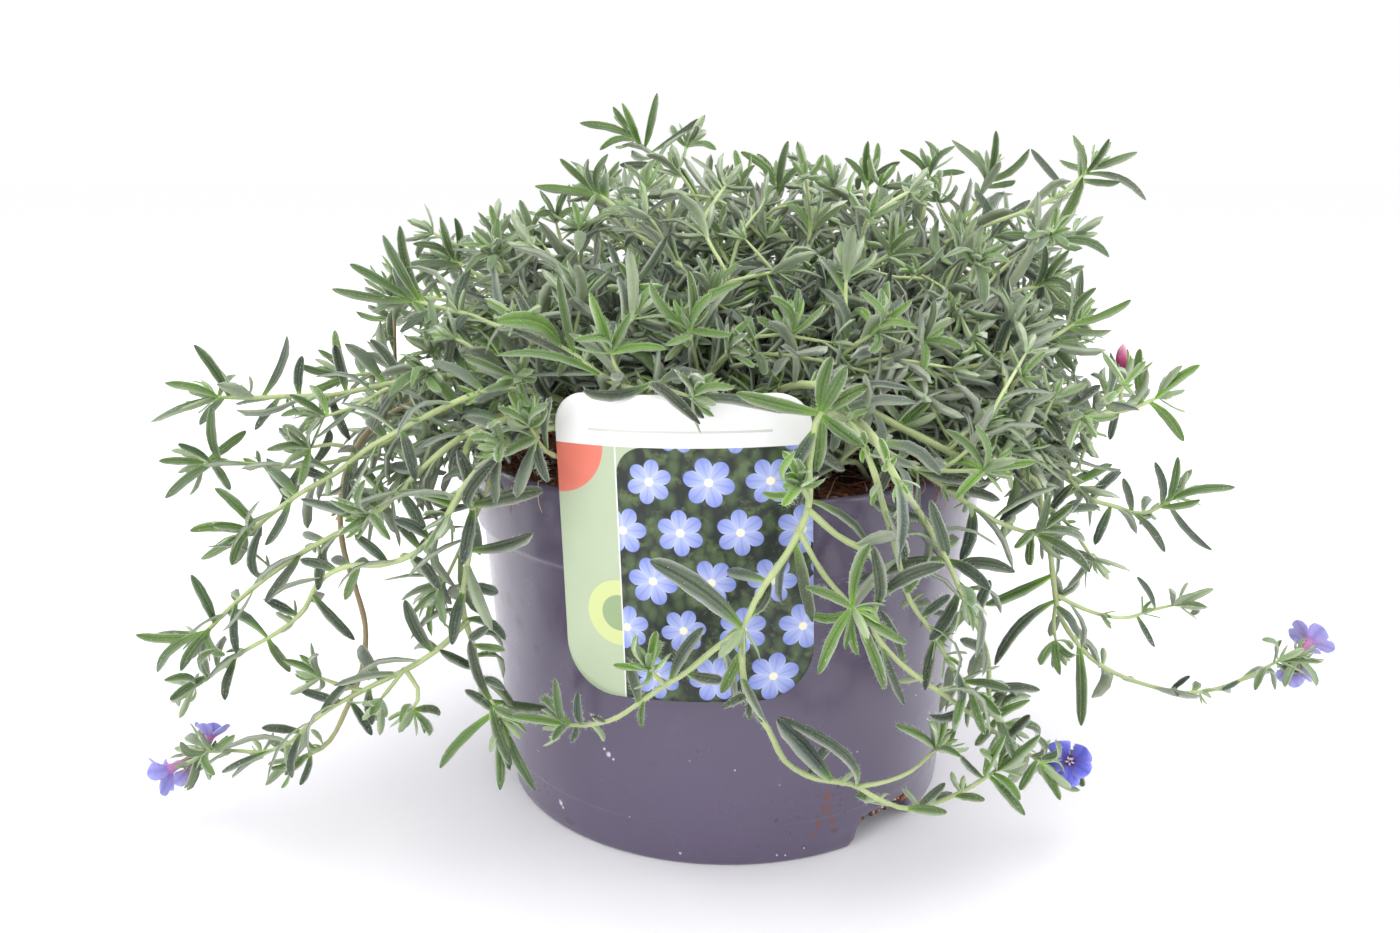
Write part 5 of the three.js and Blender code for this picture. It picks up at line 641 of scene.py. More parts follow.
def label_material():
    n = Nodes("label_print")
    u, v = n.attr("lu"), n.attr("lv")
    face = n.attr("face")
    o = n.coord()
    M = n.math
    comb = n.new("ShaderNodeCombineXYZ")
    n.put(comb.inputs[0], u)
    n.put(comb.inputs[1], v)
    uv = comb.outputs[0]
    white = n.mix(n.noise(uv, .08, 2.0), srgb(238, 238, 238), srgb(247, 247, 246))

    def box(x0, x1, y0, y1, rad, soft=.12):
        cx, cy, hx, hy = (x0 + x1) / 2, (y0 + y1) / 2, (x1 - x0) / 2 - rad, (y1 - y0) / 2 - rad
        dx = M("MAXIMUM", M("SUBTRACT", M("ABSOLUTE", M("SUBTRACT", u, cx)), hx), 0.0)
        dy = M("MAXIMUM", M("SUBTRACT", M("ABSOLUTE", M("SUBTRACT", v, cy)), hy), 0.0)
        d = M("SQRT", M("ADD", M("MULTIPLY", dx, dx), M("MULTIPLY", dy, dy)))
        return n.step(d, rad + soft, rad - soft)

    def disc(cx, cy, r, soft=.12):
        dx, dy = M("SUBTRACT", u, cx), M("SUBTRACT", v, cy)
        return n.step(M("SQRT", M("ADD", M("MULTIPLY", dx, dx), M("MULTIPLY", dy, dy))), r + soft, r - soft)

    # leafy ground of the picture
    lf = n.voronoi(n.scaled(uv, (.34, .22, 1)), 1.0)
    ln = n.noise(uv, .22, 3.0, .6)
    ground = n.mix(n.step(lf, .15, .75), srgb(72, 90, 58), srgb(26, 36, 30))
    ground = n.mix(M("MULTIPLY", n.step(ln, .5, .68), .6), ground, srgb(104, 122, 78))
    # a staggered lattice of simple rosettes
    P = 14.2
    row = M("FLOOR", M("DIVIDE", v, P * .87))
    odd = M("MODULO", M("ADD", row, 40.0), 2.0)
    su = M("ADD", M("DIVIDE", u, P), M("MULTIPLY", odd, .5))
    cu = M("FLOOR", su)
    du = M("MULTIPLY", M("SUBTRACT", M("SUBTRACT", su, cu), .5), P)
    dv = M("MULTIPLY", M("SUBTRACT", M("SUBTRACT", M("DIVIDE", v, P * .87), row), .5), P * .87)
    cell = n.new("ShaderNodeCombineXYZ")
    n.put(cell.inputs[0], cu)
    n.put(cell.inputs[1], row)
    wn_ = n.new("ShaderNodeTexWhiteNoise", noise_dimensions="2D")
    n.put(wn_.inputs["Vector"], cell.outputs[0])
    rnd = wn_.outputs[0]
    rr = M("SQRT", M("ADD", M("MULTIPLY", du, du), M("MULTIPLY", dv, dv)))
    th = M("ADD", M("ARCTAN2", dv, du), M("MULTIPLY", rnd, 6.0))
    pet = M("ABSOLUTE", M("COSINE", M("MULTIPLY", th, 3.0)))
    edge = M("MULTIPLY", M("ADD", M("MULTIPLY", M("POWER", pet, .6), .42), .58), M("ADD", M("MULTIPLY", rnd, .8), 5.4))
    inside = n.step(M("SUBTRACT", rr, edge), .14, -.14)
    pc = n.mix(n.remap(rr, .5, 6.2, 0, 1), srgb(186, 196, 240), srgb(126, 142, 214))
    pc = n.mix(M("MULTIPLY", n.step(pet, .55, .2), .5), pc, srgb(196, 206, 244))
    pc = n.mix(M("MULTIPLY", n.step(pet, .94, 1.0), .35), pc, srgb(112, 122, 198))
    pc = n.mix(n.step(rr, 1.2, .85), pc, srgb(246, 240, 214))
    picture = n.mix(inside, ground, pc)
    band = n.mix(n.noise(uv, .1, 2.0), srgb(176, 190, 160), srgb(186, 199, 170))
    coral = srgb(226, 122, 104)
    lime = srgb(206, 216, 150)
    # layout: band on the left, picture on the right, header bare, shapes at the foot on the left
    face_col = white
    pan = box(-40.0, 40.0, -12.0, 63.8, .2)
    face_col = n.mix(pan, face_col, band)
    pic = box(-15.2, 40.0, -20.0, 63.8, 7.0)
    face_col = n.mix(M("MULTIPLY", pan, pic), face_col, picture)
    left = M("MULTIPLY", pan, n.step(u, -15.1, -15.3))
    face_col = n.mix(M("MULTIPLY", left, disc(-31.0, 64.0, 12.6)), face_col, coral)
    face_col = n.mix(M("MULTIPLY", left, disc(-16.0, 22.0, 8.4)), face_col, lime)
    face_col = n.mix(M("MULTIPLY", left, disc(-16.0, 22.0, 4.6)), face_col, srgb(150, 170, 128))
    # thin frame line between the parts
    face_col = n.mix(M("MULTIPLY", pan, M("MULTIPLY", n.step(u, -15.5, -15.4), n.step(u, -15.1, -15.2))), face_col, white)
    # a single plain rule in the header
    rule = M("MULTIPLY", box(-22.0, 22.0, 67.3, 67.9, .25, .08), .5)
    face_col = n.mix(rule, face_col, srgb(150, 165, 140))
    # a little dirt
    dirt = n.noise(uv, .35, 5.0, .7)
    face_col = n.mix(M("MULTIPLY", n.step(dirt, .66, .78), .35), face_col, srgb(150, 140, 128))
    col = n.mix(face, n.mix(dirt, srgb(228, 228, 226), srgb(240, 240, 238)), face_col)
    n.bump(n.noise(n.scaled(o, 600.0), 1.0, 2.0), .08, .0001)
    m = n.finish(col, n.remap(dirt, .3, .7, .34, .46), **{"Specular IOR Level": .5})
    return m


lv_, lq_, la_ = build_label()
label_mat = label_material()
label = make("label_card", lv_, lq_, None, None, None, la_, label_mat)
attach(label, "root")
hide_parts("plant_label")


def build_tongue():
    b = Bag()
    turn = math.radians(-9.0)
    path = [(77.2, 103.9), (76.6, 104.15), (75.6, 104.15), (74.4, 104.1), (73.5, 103.7), (73.15, 102.8), (73.15, 100), (73.15, 95), (73.15, 90), (73.15, 87)]
    w = np.linspace(-7.5, 7.5, 9)
    P, Q = [], []
    for side in (0, 1):
        for k, (r, z) in enumerate(path):
            ta = np.array(path[min(k + 1, len(path) - 1)]) - np.array(path[max(k - 1, 0)])
            nn = np.array([ta[1], -ta[0]]) / np.linalg.norm(ta)
            rr, zz = r + nn[0] * (-.2 if side else .2), z + nn[1] * (-.2 if side else .2)
            a = w / 77.0 + turn
            P += [(rr * math.sin(t), -rr * math.cos(t), zz) for t in a]
    K, C = len(path), len(w)
    n = K * C
    for k in range(K - 1):
        for j in range(C - 1):
            i = k * C + j
            Q.append((i, i + C, i + C + 1, i + 1))
            Q.append((n + i, n + i + 1, n + i + C + 1, n + i + C))
    per = [j for j in range(C)] + [k * C + C - 1 for k in range(1, K)] + [(K - 1) * C + j for j in range(C - 2, -1, -1)] + [k * C for k in range(K - 2, 0, -1)]
    for a_, b_ in zip(per, per[1:] + per[:1]):
        Q.append((a_, b_, n + b_, n + a_))
    b.add(P, Q, None, np.array(srgb(238, 238, 236)))
    return b


tongue_mat = vertex_material("label_plastic", .4, 300.0, .96, 1.02, bump=.05)
tongue = build_tongue().make("label_tongue", tongue_mat)
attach(tongue, "root")


# ---------------------------------------------------------------- leaves
LT = np.array([0, .06, .14, .26, .40, .55, .70, .83, .92, .975, 1.0])
LW = np.array([.36, .44, .60, .82, .96, 1.0, .97, .86, .66, .40, .12])


class Lod:
    """A leaf as rows across: upper face points u (share of half width) at heights h, then the underside."""

    def __init__(self, rows, u, h, under, hu):
        self.t = np.array(rows)
        self.u, self.h = np.array(u), np.array(h)
        self.uu, self.hu = np.array(under), np.array(hu)
        R, C, U = len(rows), len(u), len(under)
        self.R, self.C, self.U = R, C, U
        self.n = R * (C + U)
        q = []
        top = lambda r, c: r * C + c
        und = lambda r, c: R * C + r * U + c
        for r in range(R - 1):
            for c in range(C - 1):
                q.append((top(r, c), top(r, c + 1), top(r + 1, c + 1), top(r + 1, c)))
            ring = [top(r, 0)] + [und(r, c) for c in range(U)] + [top(r, C - 1)]
            ring2 = [top(r + 1, 0)] + [und(r + 1, c) for c in range(U)] + [top(r + 1, C - 1)]
            for c in range(U + 1):
                q.append((ring[c], ring2[c], ring2[c + 1], ring[c + 1]))
        self.q = np.array(q)
        self.caps = []
        for r, rev in ((0, True), (R - 1, False)):
            p = [top(r, c) for c in range(C)] + [und(r, c) for c in range(U)][::-1]
            self.caps.append(p if rev else p[::-1])


HIGH = Lod([0, .08, .18, .31, .45, .59, .73, .85, .94, .985, 1.0],
           [-1, -.84, -.58, -.24, 0, .24, .58, .84, 1], [-.62, -.22, .10, .12, -.16, .12, .10, -.22, -.62],
           [-.80, -.45, 0, .45, .80], [-.78, -.46, -.66, -.46, -.78])
MID = Lod([0, .15, .38, .63, .87, 1.0], [-1, -.74, 0, .74, 1], [-.62, -.06, -.02, -.06, -.62], [0], [-.60])
LOW = Lod([0, .2, .5, .8, 1.0], [-1, 0, 1], [-.40, .0, -.40], [0], [-.55])

DARK = np.array(srgb(44, 58, 45))
MIDG = np.array(srgb(97, 112, 94))
YOUNG = np.array(srgb(130, 182, 40))
UNDER = np.array(srgb(134, 148, 124))
# pale of the leaf margins: the colour of their hairs with a painted sheen mixed in
EDGE_HAIR_SHEEN = np.array(srgb(212, 220, 202))
# lighter green painted on the raised ridges of the leaf as a highlight
RIDGE_HIGHLIGHT = np.array(srgb(140, 162, 112))
HAIR = np.array(srgb(226, 230, 216))
STEM = np.array(srgb(172, 186, 132))
BARK = np.array(srgb(132, 104, 76))


def leaves(bag, lod, B, T, N, w, bend, young, seed, hairs=0, tone=None, droop=0.0, profile=None, colours=None, flat=1.0, hair_len=(.5, 1.1)):
    """Many leaves at once. B foot, T tip, N upper face, w width, all in millimetres."""
    B, T, N = (np.asarray(a, float).reshape(-1, 3) for a in (B, T, N))
    n = len(B)
    if n == 0:
        return
    w, bend, young = (np.broadcast_to(np.asarray(a, float), (n,)).copy() for a in (w, bend, young))
    r = np.random.default_rng(seed)
    ch = T - B
    L = np.linalg.norm(ch, axis=1)
    d = ch / L[:, None]
    N = unit(N - d * np.sum(N * d, 1)[:, None])
    S = np.cross(d, N)
    t = lod.t
    lw = np.interp(t, LT, LW if profile is None else profile)
    side = r.normal(0, .045, n)
    tw = r.normal(0, .34, n)
    tw2 = r.normal(0, .14, n)
    late = r.uniform(.2, 1.0, n)[:, None]
    bulge = bend[:, None] * 4 * t * (1 - t) * ((1.35 - .7 * t) * (1 - late) + (.65 + .7 * t) * late) * L[:, None]
    axis = B[:, None] + ch[:, None] * t[None, :, None] + N[:, None] * bulge[:, :, None] \
        + S[:, None] * (side[:, None] * 4 * t * (1 - t) * L[:, None])[:, :, None]
    tan = unit(np.gradient(axis, t, axis=1))
    Nl = unit(N[:, None] - tan * np.sum(N[:, None] * tan, 2)[:, :, None])
    Sl = np.cross(tan, Nl)
    ang = tw[:, None] * (t[None] - .2) + tw2[:, None]
    Nr = Nl * np.cos(ang)[..., None] + Sl * np.sin(ang)[..., None]
    Sr = Sl * np.cos(ang)[..., None] - Nl * np.sin(ang)[..., None]
    hw = w[:, None] * .5 * lw[None]
    fold = r.uniform(.7, 1.35, n)[:, None] * flat
    hw = hw * (1 + .05 * np.sin(t[None] * 19 + r.uniform(0, 6.28, (n, 1))))
    edge = np.interp(t, [0, .1, .85, 1], [.4, 1, 1, .6])[None]
    top = axis[:, :, None] + Sr[:, :, None] * (hw[:, :, None, None] * lod.u[None, None, :, None]) \
        + Nr[:, :, None] * ((hw * fold * edge)[:, :, None, None] * lod.h[None, None, :, None])
    thick = np.minimum(hw * .42, .26)[:, :, None]
    hu = lod.hu[None, None] * (hw * fold * edge)[:, :, None]
    htop = np.interp(lod.uu, lod.u, lod.h)[None, None] * (hw * fold * edge)[:, :, None] - thick
    hu = np.minimum(hu, htop)
    und = axis[:, :, None] + Sr[:, :, None] * (hw[:, :, None, None] * lod.uu[None, None, :, None]) + Nr[:, :, None] * hu[..., None]
    V = np.concatenate([top.reshape(n, -1, 3), und.reshape(n, -1, 3)], 1)
    # colours
    tone = r.uniform(0, 1, n) ** 1.2 if tone is None else np.broadcast_to(tone, (n,))
    if colours is None:
        base = DARK[None] * (1 - tone[:, None]) + MIDG[None] * tone[:, None]
        base = base * r.uniform(.84, 1.16, (n, 1)) * np.array([1.0, 1.0, 1.0]) + r.uniform(-.006, .006, (n, 3))
        yo = (young[:, None] * np.interp(t, [0, .5, 1], [1.0, .8, .65])[None])
        yo = np.clip(yo + np.interp(t, [0, .1, .28], [.6, .35, 0])[None], 0, 1)
        cb = base[:, None] * (1 - yo[..., None]) + YOUNG[None, None] * yo[..., None]
        ct = np.repeat(cb[:, :, None], lod.C, 2)
        # the margins are painted paler, partly for their white hairs and partly as a painted sheen
        me = np.clip((np.abs(lod.u) - .72) / .28, 0, 1)[None, None, :, None] * .68
        # the raised ridges beside the midrib groove are painted lighter, as a highlight
        ridge = np.clip(1 - np.abs(np.abs(lod.u) - .26) / .16, 0, 1)[None, None, :, None] * .30 * np.interp(t, [0, .8, 1], [1, .7, 0])[None, :, None, None]
        # the midrib groove is painted darker, as shade
        groove_shade = np.clip(1 - np.abs(lod.u) / .12, 0, 1)[None, None, :, None] * .45
        ct = ct * (1 - ridge) + (RIDGE_HIGHLIGHT * .55 + ct * .45) * ridge
        ct = ct * (1 - groove_shade) + ct * .55 * groove_shade
        ct = ct * (1 - me) + (EDGE_HAIR_SHEEN * .8 + ct * .2) * me
        cu = np.repeat((cb * .35 + UNDER[None, None] * .65)[:, :, None], lod.U, 2)
        cm = np.clip(1 - np.abs(lod.uu) / .3, 0, 1)[None, None, :, None] * .35
        cu = cu * (1 - cm) + np.array(srgb(160, 174, 132)) * cm
    else:
        ct, cu = colours(lod, t, n, r)
    C = np.concatenate([ct.reshape(n, -1, 3), cu.reshape(n, -1, 3)], 1)
    off = (np.arange(n) * lod.n)[:, None, None]
    q = (lod.q[None] + off).reshape(-1, 4)
    base_i = bag.n
    bag.add(V.reshape(-1, 3), q, None, np.clip(C, .004, 1).reshape(-1, 3))
    for cap in lod.caps:
        a = np.array(cap)
        tri = np.array([(a[0], a[k], a[k + 1]) for k in range(1, len(a) - 1)])
        bag.t.append((tri[None] + off + base_i).reshape(-1, 3))
    if hairs:
        # short white hairs on the margins and the upper face
        hl = np.repeat(np.arange(n), hairs)
        ht = r.uniform(.06, .98, len(hl))
        kind = r.random(len(hl))
        on_edge = kind < .7
        hu_ = np.where(on_edge, np.where(r.random(len(hl)) < .5, -1.0, 1.0), r.uniform(-.85, .85, len(hl)))
        x = np.interp(ht, t, np.arange(len(t)))
        k0 = np.minimum(x.astype(int), len(t) - 2)
        f = (x - k0)[:, None]
        pick = lambda A: A[hl, k0] * (1 - f) + A[hl, k0 + 1] * f
        ax, sr, nr, tn = pick(axis), unit(pick(Sr)), unit(pick(Nr)), unit(pick(tan))
        hs = (hw * fold * edge)
        hwid = hw[hl, k0] * (1 - f[:, 0]) + hw[hl, k0 + 1] * f[:, 0]
        hgt = hs[hl, k0] * (1 - f[:, 0]) + hs[hl, k0 + 1] * f[:, 0]
        hh = np.interp(np.where(on_edge, np.sign(hu_) * .93, hu_), lod.u, lod.h)
        foot = ax + sr * (hwid * np.where(on_edge, np.sign(hu_) * .95, hu_))[:, None] + nr * (hgt * hh)[:, None]
        out = sr * (np.sign(hu_) * np.where(on_edge, 1.0, .15))[:, None] + nr * np.where(on_edge, r.uniform(-.35, .5, len(hl)), 1.0)[:, None] + tn * r.uniform(.3, .9, len(hl))[:, None]
        out = unit(out + r.normal(0, .12, out.shape))
        ln = r.uniform(hair_len[0], hair_len[1], len(hl)) * np.where(on_edge, 1.0, .6)
        wd = unit(np.cross(out, nr * .3 + tn)) * .042
        v = np.stack([foot - wd, foot + wd, foot + out * ln[:, None]], 1)
        bag.add(v.reshape(-1, 3), None, np.arange(len(hl) * 3).reshape(-1, 3), HAIR)


# ---------------------------------------------------------------- the plant's build
# n: piece; r: radius at foot and tip (1/100 mm); p: the stem's course (1/10 mm); l: its leaves, eleven numbers each:
# place on the stem (1/1000), tip (1/10 mm), width (1/10 mm), bend, youth (1/100), near the front, upper face (1/100).
STEMS = [
{"n": "shoot_left_ridge", "r": [125, 75], "o": 0, "k": 0, "f": 0, "p": [[-120,-320,1013],[-113,-383,1095],[-107,-463,1163],[-101,-559,1207],[-128,-651,1249],[-204,-694,1281],[-295,-661,1309],[-373,-613,1356],[-452,-552,
1388],[-534,-486,1400],[-608,-410,1408],[-685,-341,1425],[-776,-288,1438],[-868,-240,1457]],
 "l": [577,-547,-682,1450,64,3,55,1,67,-45,59,542,-406,-650,1551,33,2,30,1,3,-98,-20,519,-513,-670,1428,29,6,0,1,48,-68,56,473,-542,-729,1378,33,6,40,1,38,-63,68,642,-528,-530,1507,33,6,0,1,22,-97,8,731,-505,-388,1493,
37,6,0,1,-11,-79,61,838,-698,-447,1398,37,6,0,1,8,-26,96,873,-685,-281,1540,37,6,0,1,-15,-92,37,915,-868,-333,1378,37,6,0,1,-7,-76,64,990,-992,-314,1553,39,5,30,1,62,-67,40,978,-1064,-254,1483,39,9,26,1,9,-76,65,966,
-915,-261,1625,39,8,21,1,30,-94,15,954,-867,-268,1649,39,8,23,1,17,-98,5,990,-786,-359,1407,33,5,39,1,-22,-49,84,978,-977,-199,1415,33,7,27,1,-43,-66,62,995,-906,-198,1477,20,3,76,0,5,-39,92,995,-925,-231,1502,20,3,89,0,
60,20,77,995,-940,-221,1442,20,3,77,0,-13,15,98,200,-210,-627,1268,33,7,0,0,60,-3,80,266,-108,-619,1378,40,12,1,0,-31,-94,-9,367,-171,-732,1404,37,6,0,0,-96,21,17,423,-379,-705,1425,31,11,0,0,45,70,56,482,-490,-589,1309,
40,5,0,0,-3,9,100,549,-388,-488,1485,31,8,3,0,-62,-58,53,605,-571,-590,1418,38,5,3,0,12,48,87,668,-598,-371,1315,40,6,3,0,-38,28,88,722,-607,-365,1550,40,3,0,0,-73,-66,19,777,-788,-371,1373,38,7,6,0,-13,33,94,822,-674,
-205,1437,38,3,13,0,-39,-14,91,878,-847,-308,1545,31,6,14,0,59,55,59,918,-887,-244,1388,42,7,10,0,-31,19,93,969,-887,-198,1582,36,9,4,0,-50,-85,18]},
{"n": "shoot_left_ridge", "r": [80, 55], "o": 0, "k": 1, "f": 0, "p": [[-244,-674,1298],[-269,-698,1337],[-285,-694,1381]],
 "l": [990,-323,-754,1524,39,8,57,1,48,-85,-22,978,-307,-590,1451,33,4,48,1,-5,-57,82,966,-235,-739,1473,33,7,49,1,-72,-69,6,954,-151,-748,1395,33,10,70,1,-34,-60,73,990,-221,-582,1392,33,4,36,1,29,-26,92,978,-355,-798,
1422,33,5,61,1,64,-11,76,995,-313,-680,1425,20,3,89,0,70,-42,58,995,-298,-693,1451,20,3,85,0,-83,54,-17,995,-325,-718,1446,20,3,92,0,56,61,56,120,-257,-861,1341,33,10,0,0,-17,21,96]},
{"n": "shoot_left_ridge", "r": [80, 55], "o": 0, "k": 1, "f": 0, "p": [[-210,-688,1284],[-185,-752,1317],[-145,-812,1312],[-89,-819,1296]],
 "l": [125,-230,-656,1190,37,10,35,1,-28,-81,-51,400,-67,-804,1246,40,12,0,1,3,-83,55,225,-76,-892,1252,39,20,0,1,-39,-47,79,925,115,-823,1264,46,12,0,1,4,-75,66,300,-341,-783,1306,39,10,0,1,18,-85,49,990,-127,-927,1373,
33,10,34,1,95,-10,29,978,-43,-813,1348,33,5,44,1,-23,-95,20,966,-1,-904,1334,33,7,57,1,-64,-34,69,954,-66,-987,1366,33,7,35,1,29,42,86,995,-27,-812,1340,20,3,76,0,-60,-6,80,995,-30,-834,1295,20,3,76,0,2,17,98,471,-65,
-821,1347,37,11,1,0,-57,-48,67]},
{"n": "shoot_left_top", "r": [115, 70], "o": 0, "k": 0, "f": 0, "p": [[-220,-80,1013],[-229,-126,1115],[-242,-191,1208],[-263,-267,1291],[-332,-301,1371],[-427,-258,1416],[-520,-195,1439],[-608,-128,1467],[-702,-74,
1503],[-795,-30,1552]],
 "l": [990,-877,-103,1593,33,7,22,1,66,-49,57,978,-800,-90,1666,33,5,29,1,27,-91,-33,966,-758,-95,1663,33,6,21,1,-22,-91,-36,954,-913,-119,1531,39,3,14,1,29,-64,71,990,-887,44,1466,33,4,18,1,-74,-54,40,978,-705,-163,
1620,33,6,27,1,-85,-17,51,995,-841,23,1571,20,3,86,0,3,-33,94,995,-855,-22,1558,20,3,78,0,14,11,98,200,-150,-163,1342,30,10,0,0,-72,-51,47,275,-225,-395,1230,36,8,0,0,-9,-12,99,347,-370,-188,1439,38,7,0,0,24,-73,64,438,
-375,-417,1497,35,6,3,0,-22,77,60,511,-443,-190,1346,39,8,0,0,-43,26,87,582,-477,-191,1540,36,11,2,0,-85,-52,4,658,-676,-189,1358,41,6,5,0,-40,29,87,730,-577,24,1523,41,5,5,0,-45,-33,83,802,-747,-133,1570,43,6,6,0,44,62,
66,868,-803,43,1453,31,4,13,0,-27,7,96]},
{"n": "shoot_left_top", "r": [80, 55], "o": 0, "k": 1, "f": 0, "p": [[-565,-163,1454],[-622,-141,1513],[-646,-119,1591]],
 "l": [990,-671,-209,1683,33,9,34,1,98,-17,10,978,-584,-215,1675,33,3,39,1,-90,-22,38,966,-667,-48,1697,33,5,53,1,12,-82,56,954,-545,-222,1623,33,9,55,1,-60,-29,75,995,-686,-97,1635,20,3,79,0,65,-26,71,995,-629,-92,1657,
20,3,95,0,-73,-55,40,120,-558,-184,1623,34,4,0,0,-84,50,20,509,-760,-169,1581,32,8,5,0,38,26,89]},
{"n": "shoot_left_level", "r": [120, 75], "o": 0, "k": 0, "f": 0, "p": [[-280,-180,1013],[-307,-229,1108],[-347,-295,1190],[-399,-376,1248],[-483,-438,1286],[-591,-462,1295],[-702,-447,1283],[-813,-433,1269],[-922,-416,
1247],[-1032,-406,1223],[-1143,-391,1217],[-1255,-376,1210],[-1367,-360,1208]],
 "l": [900,-1136,-419,1379,40,6,0,1,-44,-90,4,821,-1125,-353,1317,37,6,0,1,2,-93,37,758,-984,-454,1113,37,6,0,1,10,-88,46,533,-708,-472,1431,40,6,0,1,-34,-94,-10,612,-930,-397,1366,37,6,0,1,15,-91,38,862,-1232,-446,1138,
33,6,0,1,2,-79,61,725,-1008,-439,1359,37,6,0,1,7,-97,-22,990,-1463,-420,1257,39,6,41,1,57,-62,54,978,-1543,-364,1141,39,8,18,1,-19,-79,59,966,-1371,-432,1358,39,3,18,1,58,-80,-16,954,-1410,-312,1316,39,6,38,1,14,-81,57,
990,-1350,-251,1248,33,3,19,1,10,-34,94,978,-1372,-449,1152,33,10,12,1,15,-59,79,995,-1440,-367,1198,20,3,89,0,-14,12,98,995,-1431,-317,1211,20,3,78,0,-12,-24,96,995,-1427,-363,1252,20,3,90,0,52,26,81,200,-470,-317,1367,
34,11,0,0,55,-72,43,260,-377,-509,1279,35,6,4,0,-43,8,90,322,-645,-377,1279,32,3,0,0,-13,-34,93,371,-581,-516,1415,32,13,0,0,-55,81,18,429,-751,-506,1189,37,7,0,0,-59,1,81,477,-758,-328,1380,35,10,0,0,-31,-70,64,522,
-860,-577,1306,40,10,0,0,-29,45,84,584,-922,-339,1135,39,11,1,0,-70,17,69,645,-1004,-368,1352,43,10,5,0,24,-72,65,706,-1107,-512,1128,36,8,6,0,-64,3,77,756,-1110,-304,1180,35,7,8,0,-53,-1,85,812,-1248,-506,1203,39,11,7,
0,-34,29,90,869,-1327,-324,1183,34,5,5,0,-26,-8,96,918,-1317,-447,1259,42,8,9,0,-25,68,69]},
{"n": "shoot_left_level", "r": [80, 55], "o": 0, "k": 1, "f": 0, "p": [[-768,-438,1273],[-853,-384,1273],[-942,-337,1269],[-1034,-300,1252]],
 "l": [990,-1093,-392,1236,33,7,48,1,37,-40,84,978,-1069,-391,1339,33,8,46,1,91,-40,3,966,-1066,-252,1372,33,9,47,1,9,-90,43,954,-1131,-359,1294,33,10,24,1,52,-65,55,995,-1089,-286,1229,20,3,92,0,-33,17,93,995,-1077,
-255,1253,20,3,97,0,-20,-22,96,995,-1111,-297,1278,20,3,78,0,32,31,90,120,-838,-309,1150,42,4,3,0,-56,52,64,354,-919,-332,1407,41,12,0,0,-77,40,-50,576,-1021,-387,1192,38,10,3,0,-64,21,74,796,-1017,-185,1286,42,9,6,0,
-48,-28,83]},
{"n": "shoot_left_level", "r": [80, 55], "o": 0, "k": 1, "f": 0, "p": [[-818,-431,1266],[-874,-493,1252],[-942,-521,1216],[-1020,-540,1192]],
 "l": [990,-1094,-621,1212,33,10,34,1,65,-46,61,978,-1123,-443,1111,33,9,21,1,-75,-61,28,966,-1065,-627,1265,33,7,28,1,90,-43,13,954,-1083,-433,1254,33,8,48,1,-20,-59,79,995,-1069,-546,1160,20,3,91,0,-52,-13,84,995,
-1096,-532,1201,20,3,76,0,7,-28,96,995,-1081,-592,1198,20,3,81,0,-18,31,93,120,-913,-502,1146,33,6,1,0,-56,-58,59,446,-1043,-521,1289,30,11,0,0,32,-32,89,693,-1011,-642,1161,38,6,6,0,-56,-8,83]},
{"n": "shoot_left_mid", "r": [115, 70], "o": 0, "k": 0, "f": 0, "p": [[-330,-240,1013],[-377,-286,1097],[-438,-341,1168],[-515,-408,1206],[-602,-470,1226],[-703,-509,1211],[-801,-517,1169],[-889,-493,1110],[-988,-473,
1068],[-1093,-453,1046],[-1199,-430,1036],[-1306,-405,1040],[-1412,-380,1035]],
 "l": [854,-1149,-474,943,37,6,0,1,17,-80,57,775,-1164,-506,939,39,6,0,1,-3,-86,52,750,-1045,-423,1133,37,6,0,1,-15,-91,40,990,-1495,-438,1053,33,6,34,1,45,-58,68,978,-1418,-483,1109,33,6,22,1,92,-3,40,966,-1479,-463,
959,39,9,23,1,3,-76,65,954,-1332,-456,1203,39,4,24,1,-7,-94,-34,990,-1306,-324,1108,39,8,31,1,1,-78,63,978,-1295,-488,988,33,8,18,1,-13,-52,85,995,-1470,-342,1041,20,3,84,0,-6,-23,97,995,-1464,-381,1062,20,3,78,0,40,22,
89,995,-1457,-382,1008,20,3,81,0,-47,13,87,200,-580,-403,1246,43,12,0,0,50,-14,86,267,-677,-357,1281,36,6,0,0,10,-61,78,342,-646,-601,1244,33,7,0,0,-43,24,87,448,-856,-555,1276,39,3,0,0,35,52,78,503,-850,-588,1029,42,12,
0,0,-91,-17,38,568,-955,-358,1136,41,7,3,0,-42,-35,84,620,-1025,-560,993,42,10,1,0,-73,5,68,676,-1106,-380,928,41,7,3,0,-70,20,68,739,-1187,-395,1133,37,7,3,0,20,-66,72,782,-1265,-475,1042,32,6,4,0,-6,28,96,824,-1262,
-314,1029,32,4,11,0,-39,-19,90,876,-1364,-476,1051,40,5,17,0,-11,41,91,929,-1419,-379,1004,34,11,12,0,-32,8,94]},
{"n": "shoot_left_mid", "r": [80, 55], "o": 0, "k": 1, "f": 0, "p": [[-953,-480,1082],[-1001,-516,1116],[-1064,-540,1113]],
 "l": [990,-1135,-624,1128,33,4,25,1,62,-40,68,978,-1076,-647,1195,33,6,35,1,-95,-10,-29,966,-1061,-625,1039,33,3,38,1,3,-64,76,954,-991,-645,1212,33,6,31,1,-87,-48,7,995,-1146,-541,1117,20,3,89,0,6,-22,97,995,-1119,
-582,1133,20,3,90,0,5,38,92,995,-1124,-580,1077,20,3,94,0,-44,-12,89,120,-963,-610,1119,40,9,2,0,-33,22,92]},
